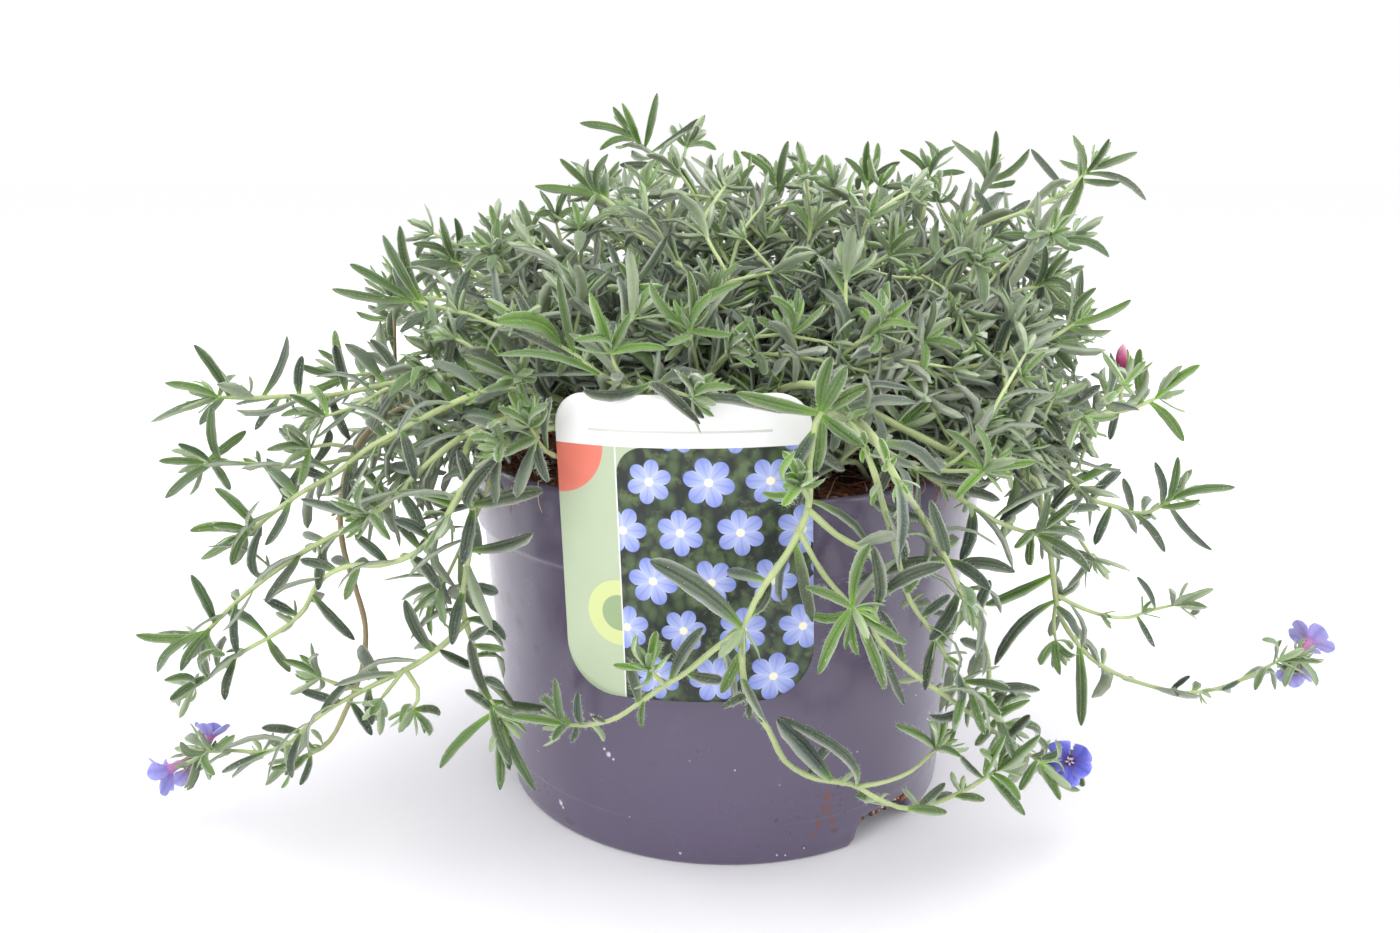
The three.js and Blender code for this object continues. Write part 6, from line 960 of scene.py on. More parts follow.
{"n": "shoot_left_low_1", "r": [120, 70], "o": 0, "k": 0, "f": 0, "p": [[-280,-340,1013],[-319,-386,1101],[-370,-439,1180],[-439,-504,1233],[-520,-567,1268],[-620,-608,1263],[-716,-615,1223],[-811,-601,1173],[-904,-583,
1119],[-990,-568,1054],[-1084,-555,1001],[-1172,-538,939],[-1255,-520,873]],
 "l": [867,-1170,-608,878,39,6,0,1,4,-86,50,767,-1095,-526,1051,37,6,0,1,-26,-70,66,712,-952,-635,991,40,6,0,1,5,-84,55,583,-763,-680,1067,42,6,0,1,-2,-81,59,990,-1366,-583,907,39,7,45,1,46,-66,59,978,-1292,-615,933,33,
4,43,1,81,-28,52,966,-1290,-585,1020,39,5,38,1,67,-74,3,954,-1395,-481,797,39,6,46,1,-45,-81,39,990,-1257,-612,826,33,4,26,1,17,-53,83,978,-1162,-629,1002,33,8,18,1,-81,-58,-3,995,-1302,-492,855,20,3,97,0,-40,-1,91,995,
-1329,-536,852,20,3,85,0,-34,22,92,995,-1277,-514,819,20,3,79,0,-88,20,43,264,-425,-594,1397,30,6,0,0,-94,22,27,333,-604,-708,1262,32,6,0,0,-25,11,96,400,-733,-566,1340,38,5,0,0,23,-63,74,465,-780,-755,1189,38,4,0,0,-56,
10,83,535,-806,-490,1104,41,11,3,0,-71,24,66,592,-954,-599,1241,37,8,4,0,46,31,83,640,-943,-672,1005,36,5,5,0,-87,-7,49,691,-1006,-452,992,33,4,9,0,-69,18,70,754,-1122,-530,1057,36,11,4,0,1,-13,99,800,-1098,-502,888,39,
10,2,0,-86,27,44,848,-1200,-471,1048,37,7,9,0,-11,-66,75,896,-1246,-633,868,39,9,15,0,-71,8,70,947,-1264,-417,827,31,12,8,0,-68,19,71]},
{"n": "shoot_left_low_2", "r": [125, 75], "o": 0, "k": 0, "f": 0, "p": [[-220,-420,1013],[-272,-466,1099],[-343,-518,1166],[-434,-576,1199],[-533,-628,1207],[-636,-661,1176],[-725,-658,1110],[-806,-635,1034],[-890,-617,
961],[-984,-591,906],[-1080,-569,852],[-1171,-549,790],[-1259,-529,722],[-1342,-509,649],[-1420,-480,574]],
 "l": [818,-1176,-600,923,35,6,0,1,-13,-94,-32,729,-1170,-645,740,39,12,0,1,4,-80,60,675,-1035,-641,770,37,6,0,1,3,-88,47,889,-1286,-570,562,33,15,0,1,17,-91,37,554,-939,-620,1051,39,6,0,1,33,-88,34,507,-744,-693,932,42,
6,0,1,4,-83,56,990,-1556,-551,611,39,5,36,1,41,-64,66,978,-1531,-519,490,39,10,23,1,-17,-88,45,966,-1446,-560,512,39,4,25,1,7,-85,52,954,-1389,-558,780,39,10,17,1,51,-83,-25,990,-1589,-424,541,39,8,19,1,-38,-65,66,978,
-1308,-597,574,33,7,43,1,-20,-36,91,995,-1474,-485,537,20,3,80,0,-57,25,78,995,-1441,-452,522,20,3,100,0,-75,37,54,995,-1475,-442,570,20,3,82,0,-20,-7,98,200,-481,-584,1312,32,12,0,0,46,-88,11,249,-519,-739,1168,31,11,0,
0,-44,-14,89,301,-672,-556,1188,39,9,0,0,-37,-37,85,356,-734,-750,1162,31,7,0,0,-34,22,91,409,-714,-665,954,34,7,0,0,-99,8,7,454,-859,-540,1069,40,13,0,0,-35,-21,91,506,-937,-715,988,34,4,0,0,-46,30,84,546,-866,-490,872,
32,7,0,0,-71,43,55,592,-1076,-588,994,41,5,1,0,31,13,94,638,-1066,-563,764,34,12,3,0,-81,22,54,675,-1131,-439,859,32,9,3,0,-44,-18,88,720,-1190,-656,791,42,9,2,0,-59,19,78,755,-1198,-593,725,32,6,6,0,-83,7,56,794,-1341,
-557,856,33,6,6,0,35,43,83,842,-1302,-608,645,32,12,6,0,-82,-2,57,880,-1339,-412,645,31,11,1,0,-63,8,78,925,-1400,-586,627,30,4,7,0,-60,23,76,961,-1397,-505,471,33,4,2,0,-95,28,11]},
{"n": "shoot_left_low_2", "r": [80, 55], "o": 0, "k": 1, "f": 0, "p": [[-828,-632,1016],[-850,-653,988],[-880,-680,979]],
 "l": [990,-941,-770,1043,33,9,42,1,88,-39,28,978,-922,-777,960,33,6,40,1,36,-33,87,966,-846,-801,1100,33,8,35,1,-66,-61,-44,954,-802,-787,951,33,6,28,1,-32,-44,84,995,-943,-709,985,20,3,80,0,18,-16,97,995,-910,-728,995,
20,3,88,0,-8,36,93,995,-927,-727,935,20,3,82,0,-41,-37,83,120,-832,-604,871,32,4,0,0,-87,-48,-11]},
{"n": "shoot_left_low_3", "r": [120, 65], "o": 0, "k": 0, "f": 0, "p": [[-160,-480,1013],[-213,-526,1091],[-289,-572,1155],[-378,-601,1182],[-480,-671,1182],[-568,-713,1136],[-637,-732,1061],[-692,-721,972],[-762,-698,
893],[-855,-668,848],[-958,-640,833],[-1043,-608,778],[-1099,-585,691],[-1181,-565,622],[-1272,-547,567],[-1357,-529,503],[-1444,-510,442]],
 "l": [556,-912,-700,935,39,6,0,1,61,-76,21,603,-953,-690,763,37,6,30,1,-11,-86,49,647,-1079,-624,844,39,6,0,1,15,-74,65,712,-954,-638,634,37,6,0,1,24,-81,54,762,-1204,-560,712,37,6,0,1,10,-75,65,831,-1142,-600,528,37,6,
20,1,19,-79,58,900,-1329,-580,438,35,18,0,1,5,-94,35,516,-704,-741,808,42,6,0,1,5,-79,61,472,-801,-739,985,42,6,0,1,56,-77,31,990,-1461,-617,513,33,7,32,1,80,11,59,978,-1529,-424,346,33,7,28,1,-77,-54,34,966,-1318,-626,
601,33,7,33,1,-87,-48,14,954,-1472,-583,440,39,10,17,1,11,-72,69,298,-547,-805,1041,33,4,2,0,-72,-50,49,349,-716,-599,1009,36,7,3,0,-67,-9,73,390,-824,-825,1040,40,7,0,0,-20,37,91,445,-676,-688,792,33,12,0,0,-85,53,-2,
495,-855,-564,942,32,4,0,0,-32,-49,81,540,-948,-754,814,32,13,0,0,-47,29,83,587,-962,-558,785,35,6,5,0,-54,11,84,622,-1030,-533,819,34,6,2,0,-40,-15,90,671,-1118,-738,784,32,6,4,0,-54,35,76,712,-1085,-474,685,42,10,5,0,
-58,28,76,830,-1334,-496,651,36,12,9,0,12,-41,91,864,-1357,-617,508,39,5,4,0,-63,14,77,907,-1366,-438,467,37,10,16,0,-66,16,73,942,-1378,-433,558,39,3,10,0,-71,-45,55]},
{"n": "shoot_left_woody", "r": [120, 80], "o": 1, "k": 0, "f": 0, "p": [[-420,-120,1013],[-496,-137,1093],[-586,-156,1157],[-695,-180,1178],[-805,-204,1179],[-911,-230,1149],[-1001,-254,1085],[-1056,-275,991],[-1077,
-298,883],[-1063,-342,780],[-1028,-375,677],[-997,-412,575],[-1003,-452,469],[-1040,-494,371],[-1094,-516,277],[-1190,-520,226]],
 "l": [813,-1057,-500,429,35,6,0,1,31,-71,64,853,-966,-527,308,35,6,0,1,18,-82,54,967,-1162,-559,176,29,6,0,1,-5,-87,49,990,-1293,-424,238,33,8,23,1,-33,-45,83,978,-1172,-626,245,33,8,47,1,18,0,98,966,-1234,-570,234,33,
6,42,1,20,-61,77,954,-1212,-399,240,33,6,20,1,-48,-24,85,995,-1245,-504,222,20,3,80,0,-16,-17,97,995,-1234,-550,221,20,3,89,0,-31,23,92,995,-1238,-495,183,20,3,91,0,-65,-1,76,200,-800,-324,1109,42,10,0,0,-49,-7,87,279,
-970,-101,1209,32,5,0,0,-20,-52,83,364,-1058,-337,1142,36,9,0,0,-19,38,90]},
{"n": "shoot_left_front", "r": [125, 80], "o": 0, "k": 0, "f": 0, "p": [[-330,-360,1013],[-380,-400,1094],[-445,-453,1159],[-522,-515,1195],[-596,-586,1193],[-643,-652,1131],[-624,-693,1036],[-632,-692,934],[-652,-680,
831],[-669,-663,730],[-649,-660,626],[-630,-662,522],[-581,-680,432]],
 "l": [521,-447,-738,1058,55,10,0,1,-31,-86,41,521,-647,-719,1151,48,6,0,1,32,-94,-10,529,-539,-766,1151,44,6,0,1,-32,-91,-24,529,-644,-758,878,46,10,0,1,15,-89,42,617,-476,-728,949,48,10,0,1,-35,-83,44,696,-571,-704,
786,42,6,0,1,-19,-75,64,708,-688,-721,657,44,6,0,1,10,-93,36,775,-560,-701,661,35,6,0,1,-3,-73,68,829,-560,-710,638,29,6,40,1,-40,-62,67,817,-592,-720,709,35,6,0,1,-74,-67,8,904,-566,-700,525,33,6,0,1,-23,-61,76,883,
-719,-719,642,39,6,0,1,74,-63,26,958,-641,-730,673,37,6,0,1,57,-81,-15,988,-560,-717,311,33,6,0,1,34,-88,34,988,-679,-647,500,37,6,0,1,16,-73,67,990,-596,-678,231,39,9,35,1,30,-95,-1,978,-749,-675,293,39,10,41,1,-20,-96,
19,966,-497,-760,468,33,9,30,1,-36,-43,82,954,-554,-719,327,39,10,14,1,35,-85,40,990,-508,-658,219,39,9,19,1,53,-84,11,995,-556,-720,374,20,3,85,0,72,-39,57,995,-517,-692,400,20,3,99,0,45,-20,87,995,-568,-662,379,20,3,
90,0,96,-8,25,200,-477,-617,1234,31,4,0,0,-42,35,84,278,-692,-545,1134,40,12,0,0,-38,-36,85,398,-596,-640,989,38,12,1,0,-19,-98,-4,528,-627,-622,856,40,6,1,0,-9,-89,-45,591,-766,-797,862,39,13,3,0,-44,3,90,648,-579,-762,
714,41,9,3,0,-58,55,-60,702,-709,-532,700,37,4,8,0,-37,40,84,753,-798,-692,659,32,9,4,0,-48,10,87,810,-595,-550,575,38,6,10,0,56,27,78,854,-591,-588,505,38,10,14,0,62,42,66,898,-554,-645,449,39,8,15,0,76,-3,65,953,-479,
-585,419,35,6,18,0,54,-25,80]},
{"n": "shoot_left_front", "r": [100, 60], "o": 0, "k": 1, "f": 0, "p": [[-656,-665,700],[-725,-661,630],[-798,-657,576],[-877,-648,532],[-956,-640,488],[-1034,-632,441],[-1102,-613,384],[-1167,-600,322],[-1248,-578,286],
[-1337,-561,281],[-1425,-544,267]],
 "l": [554,-970,-652,530,39,2,0,1,-53,-81,27,777,-1351,-599,238,28,20,0,1,-14,-73,67,636,-1214,-640,389,35,6,0,1,81,-53,24,636,-1145,-650,250,33,20,0,1,12,-80,59,459,-1114,-618,486,35,6,0,1,25,-75,61,359,-914,-681,419,
37,6,0,1,12,-84,53,136,-796,-720,774,46,6,0,1,29,-92,-26,990,-1426,-650,354,33,5,43,1,-93,-20,30,978,-1354,-633,249,33,4,39,1,-40,-38,83,966,-1384,-634,374,33,8,37,1,-85,-49,20,954,-1306,-597,346,39,5,48,1,-57,-62,53,
120,-828,-551,573,37,10,0,0,-56,-13,82,180,-933,-720,572,38,10,0,0,-19,34,92,254,-897,-543,481,32,9,0,0,-68,16,71,319,-980,-519,568,40,11,0,0,-50,-56,66,463,-1067,-721,353,37,11,0,0,-84,-22,50,569,-1180,-720,286,34,10,1,
0,-77,-5,64,621,-1189,-500,232,33,10,7,0,-73,33,59,690,-1315,-651,334,33,7,5,0,-13,64,76,745,-1355,-533,185,42,8,7,0,-69,17,70,804,-1348,-455,193,35,5,8,0,-65,38,65,915,-1472,-462,167,40,5,15,0,-75,31,58,956,-1507,-455,
265,33,13,13,0,-48,-44,76]},
{"n": "shoot_left_front", "r": [80, 55], "o": 0, "k": 1, "f": 0, "p": [[-828,-653,562],[-793,-663,501],[-810,-680,457]],
 "l": [990,-805,-807,492,33,9,47,1,14,26,96,978,-768,-564,387,33,9,25,1,93,-11,35,966,-739,-786,447,33,6,24,1,-34,-33,88]},
{"n": "shoot_left_front", "r": [80, 55], "o": 0, "k": 1, "f": 0, "p": [[-828,-653,562],[-867,-661,512],[-895,-660,478]],
 "l": [990,-883,-785,500,33,3,62,1,-3,16,99,978,-924,-538,359,33,4,56,1,-73,-57,-39,966,-891,-789,542,33,6,80,1,16,43,89,120,-1011,-657,517,32,7,1,0,-13,-32,94]},
{"n": "shoot_left_front", "r": [80, 55], "o": 0, "k": 1, "f": 0, "p": [[-941,-642,495],[-1017,-621,505],[-1068,-600,514]],
 "l": [990,-1121,-689,602,33,7,52,1,86,-3,51,978,-1154,-490,527,33,4,42,1,-25,-31,92,966,-1142,-475,416,33,4,43,1,-74,6,67,954,-1021,-721,630,33,6,21,1,-79,27,56,995,-1132,-593,520,20,3,88,0,11,16,98,995,-1128,-544,517,
20,3,96,0,-12,-18,98,995,-1122,-578,567,20,3,82,0,62,-25,74]},
{"n": "shoot_top_left", "r": [115, 70], "o": 0, "k": 0, "f": 0, "p": [[-100,180,1013],[-108,166,1116],[-116,147,1221],[-127,112,1322],[-139,82,1424],[-151,75,1530],[-163,89,1635],[-175,132,1732],[-205,186,1819],[-274,
220,1884]],
 "l": [928,-82,169,1939,33,-5,0,1,-47,-75,47,878,-312,131,1808,37,6,0,1,26,-63,74,990,-428,146,1927,39,5,36,1,47,-67,58,978,-331,161,1973,33,7,35,1,56,-83,-3,966,-304,155,1983,33,7,49,1,37,-90,-25,954,-201,141,2010,39,4,
29,1,-61,-78,-17,990,-371,142,1851,33,8,41,1,21,-58,79,995,-311,225,1944,20,3,84,0,83,23,50,995,-329,230,1907,20,3,80,0,41,3,91,995,-297,263,1920,20,3,92,0,0,-66,75,200,-110,-3,1305,36,8,0,0,-6,56,83,285,-232,194,1425,
34,5,0,0,52,-56,64,381,-49,68,1466,31,7,0,0,-76,6,65,464,-241,9,1512,39,5,0,0,41,27,87,556,-246,95,1576,37,11,3,0,42,-8,90,638,-89,7,1745,39,6,12,0,-53,60,60,722,-201,270,1784,41,3,8,0,9,-51,86,793,-104,171,1909,43,6,19,
0,-91,10,39,849,-310,214,1867,41,9,5,0,55,1,84,911,-286,299,1853,37,5,14,0,-3,-20,98]},
{"n": "shoot_top_left", "r": [80, 55], "o": 0, "k": 1, "f": 0, "p": [[-174,124,1706],[-142,152,1792],[-112,200,1866]],
 "l": [990,-88,79,1916,33,4,24,1,-23,34,91,978,-61,314,1914,33,6,27,1,23,-48,85,966,-30,93,1850,33,10,44,1,-31,-35,88,954,-162,306,1928,33,5,34,1,0,-53,85,995,-75,259,1912,20,3,92,0,-30,-47,83,995,-82,196,1919,20,3,89,0,
-67,61,43,120,-74,209,1744,37,8,0,0,-10,-7,99]},
{"n": "shoot_top_fan", "r": [115, 70], "o": 0, "k": 0, "f": 0, "p": [[-80,-200,1013],[-69,-242,1116],[-57,-291,1219],[-39,-354,1314],[-45,-388,1421],[-92,-358,1518],[-159,-284,1574],[-240,-218,1621],[-299,-148,1688],
[-376,-80,1739]],
 "l": [990,-455,-138,1821,33,4,34,1,66,-72,22,978,-375,-189,1820,33,6,41,1,-69,55,47,966,-322,-174,1833,33,6,28,1,-77,-61,-20,954,-523,-156,1750,39,6,45,1,30,-70,64,990,-450,19,1682,33,5,32,1,-77,-31,56,978,-311,23,1765,
33,5,42,1,10,-34,94,995,-405,-25,1781,20,3,92,0,2,-60,80,995,-426,-64,1795,20,3,100,0,75,18,63,995,-443,-37,1741,20,3,88,0,9,2,100,200,-56,-197,1354,30,12,0,0,6,-88,47,295,36,-428,1329,30,9,0,0,-33,20,92,391,4,-307,1502,
31,4,0,0,-36,-77,52,476,-120,-487,1569,32,6,0,0,18,69,70,565,-192,-244,1532,41,4,2,0,2,-6,100,622,-116,-230,1669,43,13,2,0,-78,-45,43,680,-314,-279,1638,42,12,6,0,34,38,86,744,-288,-67,1581,38,10,4,0,-25,3,97,809,-280,
-165,1801,34,3,11,0,-78,58,-23,882,-336,-59,1714,33,10,14,0,-3,-32,95,937,-341,-14,1783,38,10,16,0,-40,-54,74]},
{"n": "shoot_top_fan", "r": [80, 55], "o": 0, "k": 1, "f": 0, "p": [[-241,-210,1633],[-239,-202,1684],[-223,-200,1740]],
 "l": [990,-269,-306,1804,33,8,36,1,87,-8,48,978,-200,-95,1819,33,8,41,1,13,-63,77,966,-166,-322,1754,33,6,22,1,-39,-5,92,954,-282,-318,1741,33,6,30,1,52,-20,83,995,-183,-188,1810,20,3,81,0,-81,-29,52,995,-208,-225,1809,
20,3,92,0,-20,91,38,120,-109,-193,1720,35,6,0,0,-50,1,86]},
{"n": "shoot_top_left_2", "r": [115, 70], "o": 0, "k": 0, "f": 0, "p": [[-180,40,1013],[-182,0,1107],[-186,-47,1200],[-189,-114,1281],[-199,-184,1358],[-248,-221,1440],[-325,-185,1485],[-414,-134,1505],[-495,-83,1547],
[-574,-40,1600]],
 "l": [990,-611,-135,1678,33,6,45,1,94,-26,22,978,-503,-120,1696,33,5,36,1,-81,-59,3,966,-681,2,1604,33,6,17,1,-19,-70,69,954,-590,-1,1710,39,6,24,1,3,-91,40,990,-518,75,1594,33,7,31,1,29,-11,95,995,-604,-26,1649,20,3,
79,0,77,-25,59,995,-630,-33,1622,20,3,96,0,39,12,91,995,-610,20,1629,20,3,95,0,0,-46,89,200,-94,-101,1272,41,9,0,0,-64,15,76,282,-272,-171,1308,37,8,0,0,48,16,86,362,-147,-139,1426,39,8,0,0,-75,-62,23,443,-330,-283,1429,
33,8,0,0,41,11,91,536,-279,-128,1569,40,8,0,0,-11,-85,52,615,-433,-243,1546,34,8,3,0,31,49,81,677,-402,-35,1439,32,4,4,0,-37,13,92,758,-481,-135,1602,41,10,8,0,61,66,44,840,-614,-53,1507,41,10,4,0,-8,15,99,921,-539,24,
1636,32,11,4,0,-33,-63,70]},
{"n": "shoot_top_left_2", "r": [80, 55], "o": 0, "k": 1, "f": 0, "p": [[-439,-119,1516],[-462,-88,1585],[-483,-50,1651]],
 "l": [990,-512,-143,1739,33,4,51,1,97,-9,22,978,-432,-127,1753,33,4,33,1,-85,-53,2,966,-390,-153,1687,33,6,45,1,-62,-27,74,954,-524,-172,1674,33,8,32,1,48,4,87,120,-516,-162,1657,36,5,0,0,44,72,54,532,-582,-28,1621,36,
10,3,0,27,1,96]},
{"n": "shoot_top_mid", "r": [115, 70], "o": 0, "k": 0, "f": 0, "p": [[40,220,1013],[58,199,1122],[83,167,1230],[116,118,1328],[145,93,1436],[164,104,1549],[165,159,1650],[158,220,1747]],
 "l": [990,45,153,1845,39,9,45,1,68,-64,35,978,98,262,1842,33,6,25,1,8,-88,46,966,183,142,1876,39,6,23,1,-47,-84,-28,954,218,126,1808,33,8,33,1,-88,-42,22,990,115,90,1708,33,10,46,1,10,-28,95,995,154,236,1824,20,3,89,0,
-5,97,-22,995,131,260,1793,20,3,83,0,52,-49,70,995,184,266,1795,20,3,96,0,-51,-49,71,200,191,149,1224,41,6,3,0,-41,4,91,327,223,55,1284,34,12,0,0,-17,3,98,411,22,40,1434,36,10,0,0,67,25,69,496,195,1,1441,39,8,0,0,-21,42,
89,602,69,121,1617,39,10,2,0,84,-25,48,696,274,158,1654,31,6,3,0,-66,-23,72,785,73,249,1656,35,7,10,0,32,-18,93,853,266,206,1742,31,7,6,0,-68,-2,73]},
{"n": "shoot_top_mid", "r": [80, 55], "o": 0, "k": 1, "f": 0, "p": [[166,141,1620],[106,140,1677],[49,140,1736]],
 "l": [990,-33,61,1807,33,10,34,1,78,-54,30,978,29,203,1852,33,8,55,1,-16,-88,44,966,-19,25,1724,33,4,36,1,26,-23,94,954,81,34,1807,33,6,43,1,-97,-9,23,995,18,145,1790,20,3,94,0,81,-31,50,995,5,115,1789,20,3,80,0,46,60,
66,995,-9,159,1767,20,3,86,0,39,-26,88,120,14,96,1611,34,6,0,0,-18,5,98,571,49,233,1786,41,9,5,0,-8,-75,66]},
{"n": "shoot_top_front", "r": [115, 70], "o": 0, "k": 0, "f": 0, "p": [[100,-100,1013],[117,-120,1120],[144,-146,1226],[175,-167,1332],[201,-160,1441],[217,-127,1547],[240,-80,1646]],
 "l": [990,226,29,1710,33,4,25,1,-5,-53,85,978,265,-4,1738,33,8,15,1,-5,-78,62,966,309,-168,1700,33,4,35,1,-82,-36,44,954,175,-6,1696,33,5,40,1,-4,-67,74,990,316,34,1611,33,4,28,1,55,-15,82,995,243,-72,1705,20,3,90,0,49,
86,-16,995,239,-38,1693,20,3,78,0,19,-73,65,995,288,-57,1699,20,3,83,0,-72,-13,68,200,250,-99,1198,33,10,0,0,-36,-20,91,331,78,-243,1382,35,10,0,0,63,52,58,464,235,-63,1427,36,10,1,0,-23,-67,71,565,224,-243,1467,34,9,3,
0,-20,72,67,686,122,-29,1582,42,4,7,0,46,-47,76,804,336,-100,1626,37,10,11,0,-62,0,78,907,214,27,1649,43,4,14,0,16,-38,91]},
{"n": "shoot_top_centre", "r": [115, 70], "o": 0, "k": 0, "f": 0, "p": [[0,-20,1088],[16,-53,1130],[37,-96,1217],[61,-146,1314],[61,-145,1424],[29,-80,1506],[-27,-20,1582]],
 "l": [990,-76,-108,1672,33,3,42,1,90,-41,13,978,-4,43,1695,33,4,40,1,-18,-84,51,966,48,-122,1645,33,5,30,1,-88,-28,39,954,-104,-126,1605,33,4,32,1,62,-29,73,990,28,101,1549,33,7,22,1,30,9,95,995,-71,19,1616,20,3,87,0,
40,-32,86,995,-36,31,1645,20,3,98,0,-27,-77,58,200,-52,-163,1247,38,5,0,0,54,41,73,318,-84,-158,1346,38,4,0,0,73,9,67,462,142,-66,1418,34,8,0,0,-40,-66,64,580,-71,-116,1507,40,10,3,0,68,-19,71,671,130,-60,1554,40,12,4,0,
-65,-41,63,778,-75,-76,1530,41,10,6,0,42,21,88,870,20,45,1575,36,4,17,0,-27,-40,87]},
{"n": "shoot_top_centre", "r": [80, 55], "o": 0, "k": 1, "f": 0, "p": [[25,-83,1506],[77,-66,1555],[117,-40,1606]],
 "l": [990,74,-144,1686,33,8,29,1,93,-9,37,978,158,71,1666,33,4,36,1,18,-53,83,966,171,-160,1607,33,7,36,1,-29,-10,95,954,71,83,1608,33,9,25,1,-16,-11,98,995,137,-6,1671,20,3,89,0,-1,-89,46,995,174,4,1644,20,3,85,0,-36,
-32,88,995,165,-49,1670,20,3,77,0,-62,58,53,120,90,24,1566,35,3,0,0,9,-47,88,559,201,-106,1602,41,13,4,0,-19,34,92]},
{"n": "shoot_top_right", "r": [115, 70], "o": 0, "k": 0, "f": 0, "p": [[140,280,1013],[175,267,1114],[217,250,1214],[276,216,1300],[337,186,1386],[389,184,1482],[427,210,1582],[437,270,1673],[448,320,1771]],
 "l": [990,434,251,1879,33,10,30,1,0,-87,-48,978,481,363,1877,33,9,46,1,-19,-89,42,966,534,252,1818,33,6,12,1,-71,-56,43,954,364,240,1829,33,4,41,1,75,-61,23,990,435,445,1733,33,4,31,1,-31,19,93,995,465,331,1829,20,3,98,
0,-96,-2,27,995,428,339,1833,20,3,89,0,90,-26,34,995,459,368,1807,20,3,85,0,-15,-60,78,200,211,334,1297,35,4,0,0,15,-85,51,318,297,297,1435,34,8,0,0,1,-94,35,408,456,114,1323,41,6,0,0,0,0,100,516,304,124,1545,38,3,0,0,
78,47,41,596,407,308,1563,39,12,4,0,9,-64,76,688,369,286,1634,31,11,7,0,50,-53,69,780,352,244,1680,37,6,5,0,70,11,70,853,477,396,1701,33,8,14,0,-13,-27,95,934,537,391,1768,32,12,19,0,-32,-16,93]},
{"n": "shoot_top_right", "r": [80, 55], "o": 0, "k": 1, "f": 0, "p": [[434,240,1633],[381,258,1683],[332,280,1735]],
 "l": [990,254,193,1808,33,3,24,1,82,-42,39,978,316,358,1840,33,8,50,1,-24,-80,54,966,341,170,1808,33,3,35,1,-95,15,28,954,247,169,1736,33,4,29,1,33,-22,92,995,283,282,1779,20,3,83,0,66,20,72,120,312,157,1743,39,8,0,0,
19,62,76,548,299,404,1739,34,8,6,0,-7,-37,93]},
{"n": "shoot_top_right_2", "r": [115, 70], "o": 0, "k": 0, "f": 0, "p": [[260,280,1013],[302,275,1116],[354,265,1217],[424,242,1303],[494,226,1391],[555,230,1487],[600,256,1588],[626,300,1690],[644,340,1795]],
 "l": [990,605,243,1879,33,4,44,1,96,-24,14,978,702,268,1865,33,5,29,1,-84,-49,22,966,536,277,1854,33,8,43,1,65,-67,36,954,735,259,1788,33,10,32,1,-56,-51,65,990,695,449,1857,33,6,22,1,-3,-52,85,995,641,345,1863,20,3,90,
0,86,51,-2,995,641,376,1839,20,3,87,0,17,-77,61,995,683,353,1847,20,3,90,0,-80,-7,59,200,410,188,1248,40,9,3,0,-25,48,84,287,346,306,1385,40,4,0,0,72,-61,34,396,620,252,1363,43,6,3,0,-23,-12,97,496,492,98,1514,42,8,2,0,
34,66,67,587,556,320,1577,39,4,0,0,19,-79,59,672,704,194,1584,39,8,3,0,-32,27,91,740,581,192,1746,31,11,11,0,42,84,35,801,607,416,1731,35,5,11,0,16,-57,81,882,636,448,1765,42,11,17,0,5,-43,90]},
{"n": "shoot_top_right_3", "r": [115, 70], "o": 0, "k": 0, "f": 0, "p": [[320,80,1013],[364,74,1117],[419,67,1220],[493,56,1308],[568,54,1397],[638,69,1488],[695,100,1584],[740,144,1682],[792,180,1779]],
 "l": [990,787,122,1904,33,8,21,1,-19,-91,-38,978,885,112,1853,39,6,27,1,-70,-60,38,966,656,103,1878,39,6,25,1,66,-70,27,954,839,70,1760,33,6,28,1,-57,-25,78,990,766,276,1854,33,3,30,1,-10,-65,75,995,836,189,1830,20,3,
99,0,-76,1,65,995,801,184,1858,20,3,91,0,80,59,-14,995,812,231,1826,20,3,81,0,-6,-69,72,200,571,89,1232,34,10,0,0,-27,-8,96,285,430,-52,1369,32,9,0,0,43,64,63,368,519,137,1406,40,8,0,0,17,-80,57,466,687,7,1408,38,11,0,0,
-19,17,97,557,590,28,1631,40,10,0,0,83,54,13,639,723,190,1540,32,10,2,0,-2,-31,95,703,750,29,1638,39,12,5,0,-32,65,69,770,653,189,1726,38,10,4,0,70,-44,56,846,877,225,1724,36,10,6,0,-33,-13,94,916,792,69,1817,37,7,6,0,2,
77,64]},
{"n": "shoot_top_right_3", "r": [80, 55], "o": 0, "k": 1, "f": 0, "p": [[702,111,1604],[659,105,1652],[624,100,1708]],
 "l": [990,548,-8,1765,33,7,34,1,69,-10,72,978,647,203,1794,33,6,31,1,-24,-60,76,966,646,-18,1752,33,6,28,1,-78,12,61,954,536,-15,1697,33,8,37,1,25,-25,93,995,593,72,1776,20,3,92,0,40,77,50,995,575,105,1753,20,3,97,0,66,
-16,74,995,618,114,1773,20,3,97,0,-43,-89,15,120,705,55,1771,37,12,0,0,-79,56,25]},
{"n": "shoot_front_star_1", "r": [115, 70], "o": 0, "k": 0, "f": 0, "p": [[-20,-420,1013],[-37,-459,1124],[-65,-517,1227],[-83,-587,1326],[-104,-640,1433]],
 "l": [990,-191,-695,1541,39,3,44,1,66,-74,13,978,-103,-692,1566,33,10,30,1,-6,-93,-37,966,-49,-717,1518,33,7,64,1,-86,-50,3,954,22,-702,1542,39,6,51,1,-67,-69,26,990,-220,-584,1488,33,7,51,1,-2,-76,65,978,-7,-728,1424,
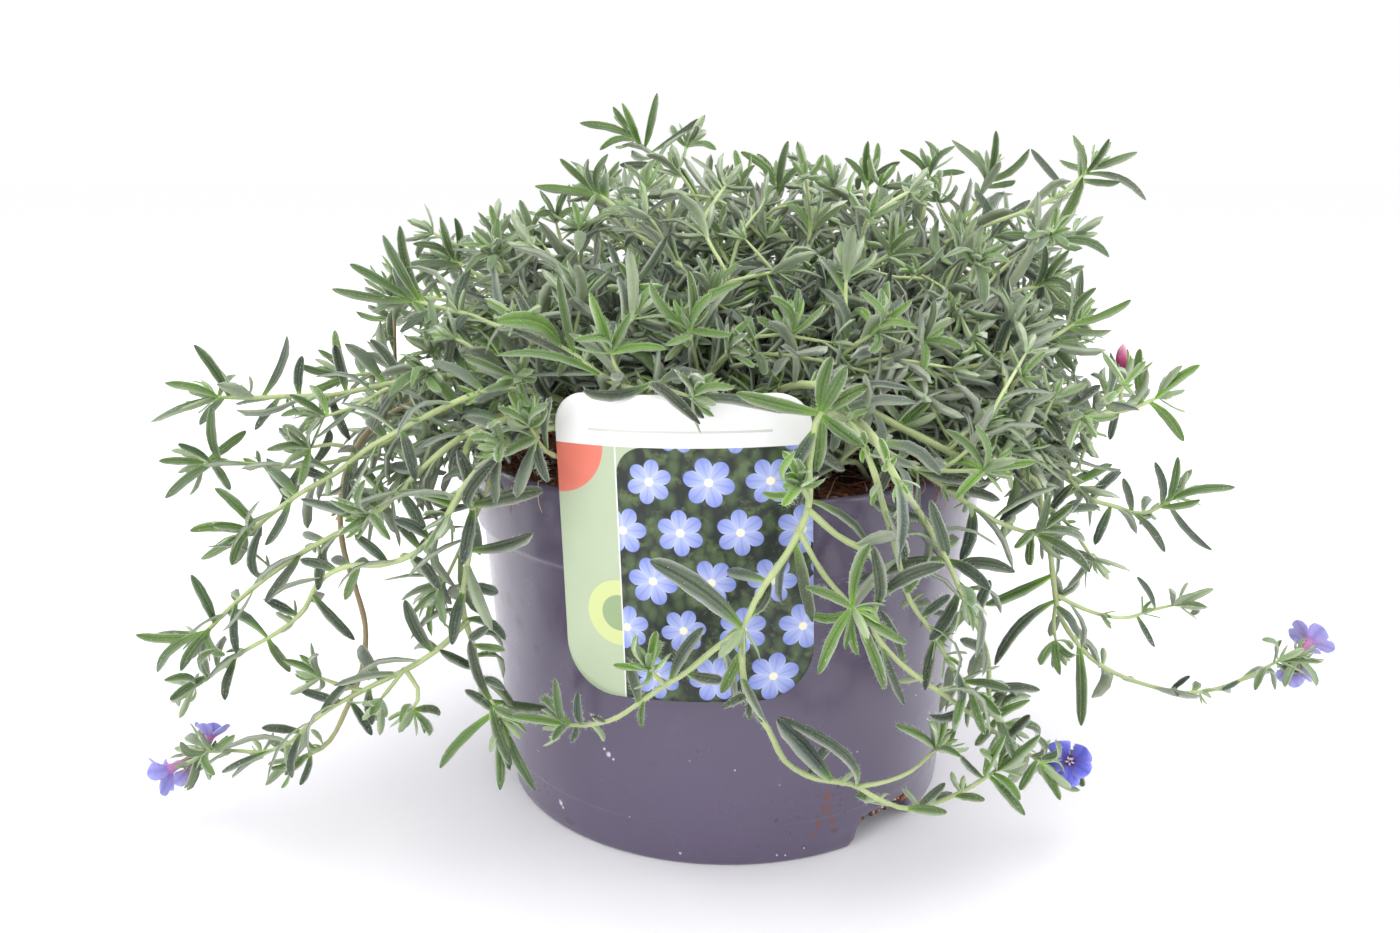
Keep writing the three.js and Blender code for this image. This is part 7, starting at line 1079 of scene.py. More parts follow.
33,5,47,1,-46,-47,76,966,-156,-751,1404,33,7,56,1,29,-24,93,995,-118,-668,1483,20,3,75,0,41,75,53,995,-108,-636,1488,20,3,75,0,0,-100,6,995,-81,-666,1500,20,3,87,0,-84,35,42,200,-102,-405,1223,38,8,6,0,53,-65,54,370,
-136,-436,1296,35,10,2,0,46,-66,59,555,-45,-683,1301,36,10,10,0,-17,30,94,692,-205,-596,1421,36,3,16,0,69,-20,69,838,5,-619,1529,39,11,8,0,-85,-23,47]},
{"n": "shoot_front_star_1", "r": [80, 55], "o": 0, "k": 1, "f": 0, "p": [[-73,-553,1276],[-46,-608,1326],[-10,-660,1374]],
 "l": [990,25,-781,1431,33,3,23,1,-62,18,77,978,37,-781,1386,33,5,29,1,-39,-5,92,966,10,-541,1423,33,9,34,1,18,-43,89,954,-39,-531,1397,33,4,54,1,-6,-22,97,990,23,-536,1306,33,5,49,1,88,2,47,995,35,-686,1424,20,3,84,0,
-72,8,69,995,19,-702,1408,20,3,89,0,-29,47,84,995,-10,-702,1447,20,3,98,0,66,65,38,120,-99,-725,1270,35,8,0,0,19,-15,97,577,-39,-646,1470,39,10,7,0,89,-45,-11]},
{"n": "shoot_front_star_2", "r": [115, 70], "o": 0, "k": 0, "f": 0, "p": [[80,-400,1013],[117,-446,1114],[165,-511,1202],[167,-570,1305],[145,-600,1418]],
 "l": [990,85,-690,1506,33,8,52,1,90,-38,21,978,213,-685,1488,33,3,57,1,-87,-34,35,966,56,-689,1458,33,3,52,1,71,-33,62,954,163,-535,1512,33,8,31,1,-13,-87,47,990,221,-481,1377,33,7,30,1,56,-10,82,978,113,-475,1351,33,8,
64,1,-70,13,70,995,111,-619,1481,20,3,81,0,79,34,51,995,140,-588,1493,20,3,86,0,-6,-99,14,995,154,-631,1468,20,3,76,0,-43,74,52,356,233,-448,1247,39,11,5,0,-51,-57,65,535,69,-624,1302,34,10,5,0,53,19,83,711,61,-574,1349,
34,13,11,0,50,-15,86,833,81,-719,1455,35,7,5,0,29,51,81]},
{"n": "shoot_front_star_2", "r": [80, 55], "o": 0, "k": 1, "f": 0, "p": [[159,-573,1334],[109,-596,1343],[57,-600,1365]],
 "l": [990,4,-713,1434,33,9,23,1,61,18,77,978,48,-494,1434,33,8,33,1,-28,-55,79,966,0,-481,1339,33,4,31,1,-71,-23,67,954,74,-722,1330,33,8,23,1,-35,-28,89,995,-11,-591,1384,20,3,99,0,25,-13,96,995,15,-592,1415,20,3,94,0,
62,-50,60,995,5,-636,1394,20,3,93,0,14,49,86,120,96,-736,1331,37,13,0,0,-41,12,91]},
{"n": "shoot_front_star_3", "r": [115, 70], "o": 0, "k": 0, "f": 0, "p": [[180,-360,1013],[196,-418,1102],[219,-485,1167],[240,-531,1248],[265,-589,1350],[348,-620,1421]],
 "l": [990,290,-707,1520,33,4,59,1,87,-50,3,978,367,-535,1512,33,4,34,1,6,-78,62,966,417,-667,1497,33,5,63,1,-66,-73,20,954,432,-678,1433,33,7,62,1,-53,-57,63,990,312,-743,1387,33,4,45,1,24,-29,93,978,296,-503,1443,33,4,
61,1,-16,-30,94,995,377,-650,1467,20,3,90,0,-22,75,62,995,368,-614,1474,20,3,96,0,-9,-99,13,995,425,-631,1440,20,3,81,0,-26,-4,96,200,52,-520,1193,31,12,0,0,53,0,85,498,225,-553,1326,30,8,0,0,62,73,29,660,255,-548,1419,
31,5,4,0,-7,-100,1,914,353,-692,1466,41,5,17,0,11,69,72]},
{"n": "shoot_front_star_3", "r": [80, 55], "o": 0, "k": 1, "f": 0, "p": [[312,-598,1376],[388,-570,1362],[478,-537,1385]],
 "l": [990,479,-627,1493,33,6,21,1,90,34,26,978,571,-441,1428,33,8,52,1,25,-59,77,966,548,-630,1379,33,6,44,1,-38,-36,85,954,452,-651,1325,33,6,47,1,13,-47,87,990,406,-651,1453,33,4,46,1,83,-20,52,995,528,-508,1412,20,3,
94,0,-28,-33,90,995,560,-523,1387,20,3,95,0,-3,9,99,995,521,-538,1428,20,3,98,0,-61,48,63,120,417,-531,1491,41,10,0,0,-5,-85,53,534,484,-474,1308,40,10,5,0,43,11,90]},
{"n": "shoot_centre_right", "r": [115, 70], "o": 0, "k": 0, "f": 0, "p": [[140,-140,1013],[137,-163,1120],[135,-194,1228],[139,-228,1334],[184,-240,1436],[259,-224,1516],[365,-201,1528],[458,-170,1578]],
 "l": [943,664,-123,1464,46,8,0,1,40,-71,58,990,374,-252,1664,33,4,33,1,82,-50,26,978,465,-100,1680,33,4,24,1,6,-83,55,966,508,-251,1643,33,7,30,1,-81,-52,26,954,546,-233,1584,33,6,32,1,-42,-63,65,990,515,-74,1485,33,7,
29,1,90,-35,26,995,506,-143,1597,20,3,79,0,-24,-24,94,995,516,-180,1613,20,3,100,0,-45,36,82,995,479,-149,1626,20,3,82,0,-4,-91,41,200,59,-78,1297,31,11,0,0,37,-64,68,301,247,-258,1376,37,8,0,0,-72,19,67,424,82,-308,
1418,39,6,0,0,50,44,74,511,196,-116,1527,42,7,0,0,5,-74,67,613,201,-157,1567,34,9,2,0,43,-71,56,700,404,-192,1462,38,7,5,0,29,7,96,866,465,-57,1570,32,3,7,0,18,-37,91,934,529,-235,1565,35,9,16,0,4,31,95]},
{"n": "shoot_right_upper", "r": [120, 70], "o": 0, "k": 0, "f": 0, "p": [[280,-20,1013],[304,-27,1117],[339,-37,1221],[386,-47,1320],[447,-45,1411],[516,-33,1496],[594,-8,1569],[691,12,1616],[792,33,1652],[894,57,1686],
[990,79,1734],[1071,100,1805]],
 "l": [914,873,50,1851,37,6,0,1,48,-82,30,973,1222,64,1709,35,10,0,1,11,-80,59,791,905,0,1570,37,6,0,1,8,-89,45,714,722,60,1737,39,6,0,1,18,-90,41,727,893,93,1708,37,6,0,1,9,-76,64,990,1174,40,1843,39,10,23,1,-55,-62,55,
978,1082,16,1878,33,8,20,1,-88,-45,-11,966,984,31,1889,33,5,38,1,61,-78,-11,954,1128,27,1760,33,7,21,1,-34,-62,71,990,1003,196,1823,33,6,37,1,-34,-43,84,995,1117,122,1835,20,3,96,0,-43,-31,85,995,1089,131,1849,20,3,83,0,
0,-83,56,200,258,-5,1416,35,5,0,0,83,-29,48,259,315,-78,1428,39,12,0,0,84,23,49,321,508,62,1439,43,9,0,0,-11,-47,88,402,609,-105,1508,33,5,0,0,-25,32,91,478,535,-5,1671,36,6,0,0,99,-13,2,553,706,76,1582,33,4,2,0,6,-18,
98,611,790,-115,1683,37,9,2,0,5,57,82,682,829,150,1729,40,10,4,0,14,-65,75,749,937,91,1626,31,4,5,0,27,2,96,798,964,-44,1763,35,11,10,0,7,70,71,848,1038,207,1730,33,5,11,0,15,-32,94,898,1077,176,1752,33,12,10,0,5,-29,96,
956,1053,146,1865,35,8,8,0,37,-83,41]},
{"n": "shoot_right_fan", "r": [115, 70], "o": 0, "k": 0, "f": 0, "p": [[330,-120,1013],[349,-149,1114],[375,-185,1213],[410,-233,1304],[479,-260,1383],[575,-249,1429],[677,-215,1448],[781,-189,1468],[884,-160,1487]],
 "l": [990,912,-238,1585,33,6,34,1,-72,-65,-23,978,998,-114,1533,33,9,28,1,6,-76,65,966,947,-235,1462,33,6,20,1,-29,-61,74,954,846,-241,1598,33,8,16,1,4,-86,-51,990,943,-63,1390,33,3,36,1,88,-44,17,995,941,-146,1529,20,
3,79,0,-55,-10,83,995,936,-118,1494,20,3,92,0,5,-24,97,995,941,-171,1486,20,3,94,0,4,23,97,200,313,-263,1252,41,3,0,0,45,41,79,285,303,-267,1347,43,13,0,0,72,21,67,389,480,-146,1436,31,7,0,0,-9,-78,62,486,611,-337,1360,
39,9,0,0,14,5,99,589,629,-374,1490,42,10,2,0,19,60,78,681,684,-111,1428,40,11,4,0,36,-10,93,761,819,-287,1436,30,6,10,0,26,29,92,846,826,-215,1613,36,7,8,0,35,94,-4,905,932,-90,1415,42,4,11,0,38,5,92]},
{"n": "shoot_right_fan", "r": [80, 55], "o": 0, "k": 1, "f": 0, "p": [[657,-223,1443],[728,-181,1504],[802,-141,1560],[885,-100,1598]],
 "l": [990,949,-153,1692,33,7,39,1,-71,-70,12,978,985,9,1620,33,10,47,1,32,-48,82,966,1069,-104,1557,39,9,23,1,12,-76,64,954,742,-172,1623,33,8,28,1,45,-62,64,990,822,-210,1675,33,4,39,1,88,-18,44,995,943,-70,1610,20,3,
84,0,-15,-9,98,995,941,-100,1639,20,3,91,0,-55,35,76,995,916,-53,1647,20,3,83,0,7,-74,67,120,699,-202,1619,42,4,0,0,81,57,-11,365,739,-32,1581,39,10,0,0,38,-42,83,567,913,-182,1586,38,5,4,0,-21,35,91,767,860,-93,1735,43,
4,5,0,98,-7,-19]},
{"n": "shoot_right_level", "r": [115, 70], "o": 0, "k": 0, "f": 0, "p": [[220,-300,1013],[230,-357,1110],[247,-438,1190],[299,-509,1259],[404,-500,1289],[517,-477,1294],[625,-441,1304],[733,-404,1324],[836,-369,1363],
[931,-330,1414]],
 "l": [728,708,-450,1424,39,6,0,1,-23,-95,-21,789,800,-441,1255,39,6,0,1,12,-82,56,611,511,-500,1380,40,6,0,1,69,-71,16,628,681,-504,1241,40,6,0,1,3,-73,68,990,900,-388,1546,33,7,16,1,20,-92,-33,978,926,-428,1502,33,8,
32,1,-95,-28,-12,966,1025,-408,1470,39,9,44,1,-62,-57,54,954,980,-417,1394,33,8,25,1,-41,-49,77,990,896,-239,1479,33,5,42,1,-9,-60,79,995,958,-327,1465,20,3,92,0,-73,57,38,995,969,-280,1463,20,3,79,0,-9,-66,74,995,993,
-312,1418,20,3,84,0,-10,2,100,200,315,-382,1332,31,4,0,0,-40,-83,40,276,376,-633,1208,33,6,0,0,4,-9,100,372,419,-582,1435,39,6,0,0,15,93,32,455,476,-490,1378,32,6,0,0,80,14,-58,531,649,-574,1282,37,4,3,0,25,32,91,618,
630,-362,1418,41,10,2,0,47,-78,41,675,790,-357,1223,32,12,4,0,41,13,90,738,832,-478,1415,32,9,9,0,-20,69,69,802,813,-245,1395,38,6,7,0,31,-47,83,876,978,-391,1339,40,8,16,0,14,19,97,945,902,-305,1518,36,5,13,0,87,-49,
5]},
{"n": "shoot_right_level", "r": [80, 55], "o": 0, "k": 1, "f": 0, "p": [[405,-496,1281],[479,-454,1311],[551,-400,1315],[624,-346,1313],[702,-300,1319]],
 "l": [990,750,-400,1379,33,8,29,1,-81,-8,58,978,783,-378,1305,33,5,21,1,-32,-52,79,966,689,-429,1416,33,4,37,1,92,23,32,954,627,-424,1395,33,5,30,1,86,-12,50,995,746,-258,1338,20,3,89,0,-8,-33,94,995,750,-270,1306,20,3,
83,0,20,11,97,995,760,-302,1327,20,3,93,0,-11,33,94,120,562,-556,1373,35,5,0,0,-4,65,76,286,516,-342,1383,33,11,3,0,44,-57,69,491,625,-358,1242,35,5,0,0,52,38,77,681,689,-313,1462,37,6,8,0,65,53,-54,846,688,-201,1269,33,
13,7,0,44,20,87]},
{"n": "shoot_right_bud", "r": [120, 70], "o": 0, "k": 0, "f": 0, "p": [[340,-260,1013],[359,-319,1107],[386,-403,1180],[441,-485,1235],[550,-488,1250],[658,-450,1243],[766,-414,1227],[869,-380,1188],[974,-343,1162],
[1081,-301,1160],[1185,-260,1189]],
 "l": [985,1271,-296,1284,39,4,70,1,-59,-70,40,950,1103,-301,1328,37,6,40,1,12,-99,-10,970,1243,-312,1077,42,-2,50,1,17,-86,48,725,994,-331,1235,39,6,0,1,-3,-78,62,805,901,-399,1274,39,6,0,1,67,-74,8,645,828,-561,1138,
40,6,0,1,-6,-41,91,580,610,-480,1255,42,6,0,1,40,-68,61,880,1027,-349,1089,31,6,0,1,-13,-83,54,620,719,-437,1320,40,6,0,1,50,-86,9,1000,1218,-254,1235,24,6,90,1,-39,-83,40,200,332,-545,1216,39,4,2,0,36,10,93,274,536,
-413,1284,41,6,8,0,-14,-58,80,344,613,-507,1113,34,6,0,0,72,-4,70,409,660,-512,1351,39,5,6,0,-31,79,52,467,722,-322,1201,40,7,1,0,41,1,91,576,839,-389,1360,42,12,9,0,74,24,-63,633,852,-275,1133,32,8,5,0,62,23,75,693,974,
-434,1181,36,8,9,0,25,40,88,754,995,-232,1234,40,11,13,0,37,-56,74,883,1133,-283,1279,36,11,10,0,79,32,-52,930,1163,-169,1161,31,4,23,0,35,-11,93]},
{"n": "shoot_right_bud", "r": [80, 55], "o": 0, "k": 1, "f": 0, "p": [[1059,-310,1162],[1061,-310,1204],[1062,-310,1251]],
 "l": [990,982,-438,1299,33,5,48,1,39,11,91,978,1141,-187,1274,33,9,60,1,5,-23,97,995,1074,-291,1326,20,3,100,0,-52,-81,28,995,1073,-331,1309,20,3,100,0,-45,81,38]},
{"n": "shoot_right_drop", "r": [115, 70], "o": 0, "k": 0, "f": 0, "p": [[380,-240,1013],[428,-291,1095],[498,-361,1140],[585,-419,1170],[688,-441,1198],[790,-418,1193],[851,-401,1106],[905,-382,1013],[974,-355,933],
[1070,-324,894],[1164,-291,865],[1262,-260,903]],
 "l": [959,1174,-304,1016,35,6,0,1,36,-93,-9,873,1079,-334,978,35,6,0,1,43,-90,-6,977,1363,-298,759,33,-6,0,1,29,-84,46,804,1006,-368,798,37,6,0,1,-19,-88,44,741,1078,-310,995,37,6,0,1,-11,-79,60,677,862,-410,910,37,6,0,
1,-8,-80,60,873,1211,-344,769,35,10,0,1,14,-87,46,604,970,-359,1091,37,6,0,1,-3,-81,59,990,1387,-335,953,39,7,31,1,-54,-50,68,978,1228,-320,1034,33,8,31,1,-9,-93,-35,966,1319,-214,972,33,8,21,1,-19,-71,68,954,1288,-350,
921,33,3,45,1,-66,-29,69,995,1314,-264,932,20,3,92,0,-45,25,86,995,1300,-228,956,20,3,84,0,-29,-70,66,995,1324,-218,908,20,3,85,0,0,-16,99,200,590,-408,1318,35,9,0,0,66,-63,-42,280,638,-510,1216,32,10,3,0,22,52,83,345,
795,-475,1153,43,4,0,0,31,0,95,423,799,-296,1150,36,8,1,0,56,15,82,496,805,-453,1033,37,12,0,0,98,-21,-6,563,1031,-438,1030,38,4,0,0,37,26,89,617,885,-296,942,32,12,4,0,62,57,53,686,970,-417,862,31,9,3,0,96,0,28,752,
1115,-225,967,35,13,2,0,16,-49,85,808,1146,-298,807,32,7,8,0,67,22,71,852,1192,-282,861,34,7,12,0,18,7,98,906,1228,-180,874,31,10,12,0,31,-27,91]},
{"n": "shoot_right_long", "r": [130, 65], "o": 0, "k": 0, "f": 0, "p": [[300,-380,1013],[294,-395,1095],[271,-492,1180],[249,-584,1245],[308,-639,1243],[399,-647,1194],[493,-645,1147],[588,-612,1096],[688,-575,1072],
[777,-539,1026],[810,-503,928],[846,-479,828],[872,-455,725],[902,-430,624],[961,-408,534],[1034,-383,458],[1123,-356,401],[1220,-330,358],[1323,-309,328],[1429,-289,330],[1532,-264,358],[1630,-240,399]],
 "l": [676,987,-443,292,46,4,20,1,-10,-98,17,838,1320,-347,398,24,10,0,1,-79,-58,22,836,1262,-411,367,24,6,0,1,9,28,96,940,1440,-300,332,24,6,0,1,1,-53,85,562,681,-499,674,48,10,40,1,-8,-77,63,600,721,-490,497,42,15,0,1,
-28,-81,52,500,922,-460,953,40,6,0,1,-18,-81,55,450,684,-572,933,42,6,0,1,1,-74,67,529,959,-506,802,40,6,0,1,-15,-82,55,993,1680,-264,371,28,6,30,1,5,-64,77,998,1742,-261,402,28,6,30,1,-14,-57,81,990,1510,-349,509,33,6,
40,1,82,-16,55,978,1501,-364,362,33,5,28,1,14,-25,96,966,1678,-150,259,33,10,30,1,76,-19,63,995,1679,-247,439,20,3,76,0,-55,33,77,995,1698,-225,394,20,3,86,0,0,1,100,200,327,-814,1161,32,10,1,0,65,-30,70,236,523,-628,
1280,33,7,0,0,-45,-42,79,268,526,-556,1026,40,9,0,0,82,21,53,308,653,-707,1105,34,11,0,0,39,40,83,340,678,-463,1162,36,12,0,0,39,-56,73,379,780,-585,964,32,8,0,0,74,21,63,419,873,-583,1061,33,4,0,0,4,60,80,458,759,-327,
922,34,8,3,0,36,29,89,493,829,-598,788,31,13,1,0,82,-38,43,528,944,-390,788,40,8,0,0,20,13,97,558,914,-397,645,38,6,3,0,55,58,60,595,981,-316,681,39,6,2,0,7,-12,99,625,909,-352,521,32,6,2,0,63,60,50,659,1045,-381,447,41,
7,2,0,67,23,70,690,1017,-241,518,42,4,5,0,63,-20,75,721,1058,-315,315,43,5,6,0,80,51,32,785,1174,-238,335,31,10,9,0,63,28,73,814,1315,-431,379,42,10,6,0,39,50,77,871,1404,-212,295,31,8,6,0,51,1,86,919,1490,-205,285,41,4,
7,0,56,30,77,941,1630,-189,342,40,10,5,0,14,-12,98]},
{"n": "shoot_right_long", "r": [80, 50], "o": 0, "k": 1, "f": 0, "p": [[887,-444,680],[958,-414,637],[1036,-389,601],[1119,-360,581],[1200,-324,589],[1286,-300,598]],
 "l": [830,1143,-340,694,31,6,0,1,56,-80,23,680,1203,-365,495,29,6,0,1,28,-89,37,990,1312,-408,632,33,7,32,1,-46,15,88,978,1270,-422,681,33,5,53,1,-11,58,81,966,1377,-181,516,33,8,23,1,70,-15,70,954,1198,-431,690,33,9,
24,1,75,8,66,995,1334,-262,605,20,3,86,0,7,-27,96,995,1350,-308,587,20,3,92,0,17,18,97,120,968,-444,527,30,8,0,0,94,19,27]},
{"n": "shoot_right_long", "r": [80, 55], "o": 0, "k": 1, "f": 0, "p": [[891,-440,664],[883,-449,607],[891,-460,551]],
 "l": [990,817,-569,534,33,7,44,1,25,-32,91,978,904,-576,565,33,10,51,1,-55,2,84,966,880,-546,494,33,9,42,1,-19,-55,82,995,889,-480,488,20,3,81,0,40,-88,26,995,928,-481,504,20,3,95,0,56,-50,66,995,895,-438,496,20,3,77,0,
19,-92,-34,120,929,-519,590,31,12,0,0,-6,-63,77]},
{"n": "shoot_right_front_1", "r": [115, 70], "o": 0, "k": 0, "f": 0, "p": [[260,-440,1013],[264,-401,1079],[247,-509,1159],[225,-674,1230],[276,-758,1219],[363,-720,1147],[450,-706,1097],[533,-673,1036],[614,-639,975],
[698,-596,924],[793,-560,886]],
 "l": [775,556,-708,873,46,6,0,1,-5,-88,47,585,605,-703,1073,48,6,0,1,14,-81,58,680,639,-720,1029,44,6,0,1,-14,-75,64,515,321,-769,1043,44,6,0,1,2,-88,47,990,901,-635,816,39,8,14,1,-1,-73,68,978,844,-628,989,33,3,32,1,
-76,-62,18,966,690,-697,900,33,10,36,1,41,-22,89,954,926,-513,860,39,7,15,1,39,-66,64,990,776,-663,1025,33,6,19,1,16,-80,-58,978,737,-674,848,33,8,27,1,11,-42,90,995,863,-560,869,20,3,96,0,24,23,94,995,856,-522,901,20,3,
96,0,-6,-21,98,995,823,-528,851,20,3,84,0,59,22,78,200,300,-615,1171,32,4,0,0,-28,-3,96,399,363,-657,1093,35,13,0,0,83,-2,56,476,474,-802,1125,38,3,0,0,45,40,80,538,437,-542,1107,39,10,0,0,62,-6,78,591,451,-699,965,30,
12,2,0,96,27,8,658,653,-684,1078,36,3,3,0,-10,33,94,715,589,-504,1005,32,4,7,0,56,-4,83,784,675,-746,865,40,3,6,0,86,3,51,846,818,-581,1024,42,7,5,0,-44,26,86,897,725,-449,846,35,8,8,0,59,29,75]},
{"n": "shoot_right_front_1", "r": [80, 55], "o": 0, "k": 1, "f": 0, "p": [[434,-702,1102],[513,-743,1106],[591,-749,1110]],
 "l": [990,480,-805,1219,33,6,43,1,65,-70,29,978,542,-826,1235,33,6,60,1,71,-69,-16,966,678,-639,1131,33,4,51,1,37,-47,80,954,691,-801,1143,33,5,65,1,-49,-62,61,990,688,-643,1032,33,10,72,1,79,-41,45,978,502,-844,1065,
33,9,73,1,24,-58,78,966,489,-675,1103,33,7,64,1,-44,-51,74,995,669,-732,1112,20,3,98,0,2,-17,98,995,652,-778,1109,20,3,91,0,11,20,97,995,650,-752,1158,20,3,99,0,-63,-1,78,120,463,-853,1157,39,11,0,0,56,33,76,621,636,
-652,1087,31,5,15,0,38,-23,90]},
{"n": "shoot_right_front_2", "r": [120, 75], "o": 0, "k": 0, "f": 0, "p": [[200,-460,1013],[209,-558,1116],[233,-600,1185],[264,-665,1230],[303,-852,1223],[335,-1035,1163],[431,-800,1023],[492,-790,927],[542,-780,826],
[594,-767,726],[632,-745,622],[647,-725,513],[700,-700,423]],
 "l": [600,435,-896,1080,44,6,0,1,46,-83,-33,617,656,-827,886,46,6,0,1,-22,-79,57,604,592,-857,853,42,6,0,1,-21,-73,65,604,300,-802,857,48,10,0,1,-7,-82,56,667,460,-858,729,42,6,0,1,-3,-77,64,512,309,-851,1067,46,6,0,1,
54,-68,50,733,604,-810,859,39,6,0,1,-38,-89,-25,817,545,-799,704,39,6,0,1,66,-68,33,896,759,-760,555,39,6,0,1,-27,-73,62,990,818,-611,353,33,10,15,1,70,-49,52,978,720,-809,552,33,7,46,1,-97,-24,9,966,647,-617,327,33,9,
46,1,-79,-57,-23,954,707,-773,371,39,3,13,1,-1,-86,51,995,748,-704,382,20,3,93,0,66,26,70,995,743,-659,395,20,3,89,0,48,16,86,995,701,-684,350,20,3,85,0,83,54,17,243,231,-762,1158,32,8,0,0,12,-57,82,301,283,-884,1361,31,
12,0,0,79,45,42,357,429,-1015,1169,41,10,0,0,-8,-49,87,412,321,-1171,1045,34,7,0,0,62,-55,56,463,368,-772,1133,33,5,0,0,51,-20,83,510,427,-820,868,31,10,2,0,74,64,-21,548,589,-905,975,31,4,0,0,21,29,93,592,520,-635,849,
33,12,4,0,62,23,75,639,557,-901,702,39,12,4,0,87,-29,39,673,658,-731,744,36,7,4,0,52,11,85,712,497,-750,669,43,10,6,0,16,98,11,760,595,-835,627,32,12,9,0,84,-44,32,805,617,-639,525,41,8,14,0,51,66,55,846,534,-741,485,34,
13,10,0,-58,65,49,882,727,-684,495,33,6,9,0,35,43,83,924,641,-623,410,37,7,6,0,50,61,61,956,771,-658,488,34,10,20,0,-10,-14,98]},
{"n": "shoot_right_front_3", "r": [110, 70], "o": 0, "k": 0, "f": 0, "p": [[150,-460,1013],[168,-519,1103],[189,-624,1185],[201,-698,1241],[259,-848,1241],[300,-914,1161],[339,-887,1045],[377,-852,931],[411,-838,823],
[475,-822,731],[530,-802,633],[598,-770,546]],
 "l": [714,435,-880,922,37,6,30,1,-54,-82,-20,773,498,-870,845,33,6,0,1,-68,-73,13,832,455,-859,602,37,6,0,1,-13,-93,36,568,385,-900,941,37,6,0,1,6,-95,30,990,633,-870,543,33,9,36,1,-32,-25,91,978,612,-832,471,33,7,32,1,
3,-87,50,966,530,-863,514,33,8,40,1,2,-63,78,954,657,-855,600,33,3,14,1,-46,-51,72,995,654,-741,521,20,3,92,0,37,17,91,995,613,-733,494,20,3,98,0,70,46,55,995,643,-791,493,20,3,81,0,77,23,59,200,241,-751,1194,31,10,0,0,
-8,-7,99,253,188,-649,1347,31,5,0,0,21,-94,25,315,408,-826,1286,39,12,0,0,-31,-42,85,429,376,-999,1182,34,5,0,0,0,-7,100,535,361,-961,935,34,7,0,0,98,0,21,594,487,-790,908,41,11,2,0,32,35,88,639,272,-832,787,37,8,1,0,
-25,92,31,687,532,-863,825,40,9,4,0,33,17,93,746,470,-692,692,32,3,6,0,68,29,68,796,505,-897,621,32,9,6,0,93,-9,37,849,511,-655,710,37,7,7,0,58,-12,80,906,515,-763,495,35,10,9,0,76,64,11,945,653,-772,624,33,11,18,0,-30,
23,92]},
{"n": "shoot_front_main", "r": [130, 100], "o": 0, "k": 0, "f": 0, "p": [[60,-440,1013],[64,-490,1104],[78,-553,1189],[101,-626,1264],[162,-698,1304],[247,-785,1297],[188,-846,1258],[166,-878,1161],[166,-880,1055],[122,
-898,960],[63,-910,873],[20,-910,776]],
 "l": [536,2,-890,1320,46,7,35,1,33,-88,34,536,208,-890,1399,46,7,35,1,-40,-87,-27,536,242,-870,1374,46,7,35,1,-49,-87,-1,536,294,-851,1328,46,7,35,1,-32,-87,38,536,279,-927,1208,46,7,35,1,-39,-74,55,536,180,-870,1137,
46,7,35,1,-25,-94,24,573,123,-890,1147,46,10,0,1,-15,-90,42,623,144,-848,1054,46,10,0,1,-27,-95,-16,614,257,-795,1122,42,6,0,1,69,-72,7,996,-187,-922,946,59,10,0,1,30,-90,31,968,81,-881,888,48,10,0,1,-21,-86,46,200,125,
-681,1226,32,12,0,0,-10,14,99,343,104,-794,1409,39,8,0,0,78,26,56,458,384,-897,1329,30,9,0,0,-47,-33,82,576,183,-788,1062,32,5,4,0,-93,-34,-18,709,313,-887,954,40,6,10,0,64,-6,77,793,171,-987,827,37,6,7,0,-61,-73,30,888,
-11,-800,883,40,9,2,0,-49,-31,81]},
{"n": "shoot_front_main", "r": [80, 55], "o": 0, "k": 1, "f": 0, "p": [[168,-879,1076],[156,-898,1098],[147,-920,1119]],
 "l": [990,121,-1029,1222,33,9,100,1,-98,7,-18,978,97,-1039,1109,33,9,94,1,21,-16,96,966,106,-918,1116,33,8,96,1,-2,-75,66,954,160,-1069,1177,33,5,97,1,-47,30,83,995,130,-953,1190,20,3,76,0,61,65,45,995,154,-987,1167,20,
3,77,0,-29,54,79,995,115,-979,1153,20,3,84,0,27,37,89]},
{"n": "shoot_front_main", "r": [100, 65], "o": 0, "k": 1, "f": 0, "p": [[20,-910,776],[-44,-899,723],[-102,-882,663],[-165,-860,611],[-224,-836,555],[-282,-805,501],[-348,-766,464],[-422,-730,444]],
 "l": [386,-69,-917,784,46,6,0,1,-68,-72,11,300,-23,-910,652,39,6,0,1,-21,-71,68,571,-249,-866,690,40,6,0,1,2,-98,-21,529,-213,-874,512,24,6,30,1,-18,-87,46,893,-373,-787,562,31,6,0,1,-21,-94,-28,929,-396,-768,418,26,6,
0,1,-24,-81,54,771,-336,-830,520,22,6,0,1,82,-7,57,990,-428,-785,598,33,8,32,1,-20,-92,-33,978,-535,-791,500,33,5,43,1,52,-48,71,966,-427,-860,473,33,5,38,1,1,19,98,954,-487,-653,474,33,4,28,1,-27,-49,83,995,-477,-707,
417,20,3,79,0,-37,18,91,995,-475,-671,452,20,3,82,0,-16,-26,95,995,-479,-730,458,20,3,94,0,21,34,92,120,3,-887,570,38,7,0,0,-90,40,-18]},
{"n": "shoot_front_main", "r": [80, 55], "o": 0, "k": 1, "f": 0, "p": [[-158,-862,616],[-179,-879,647],[-196,-900,677]],
 "l": [990,-214,-1006,802,33,5,92,1,-94,31,12,978,-251,-773,635,33,8,99,1,-55,3,83,966,-146,-1021,764,33,4,100,1,-80,11,59,954,-172,-787,698,33,6,100,1,5,-22,97,995,-231,-915,745,20,3,81,0,89,-9,44,995,-196,-948,736,20,
3,93,0,-35,73,59,995,-237,-947,707,20,3,98,0,30,31,90]},
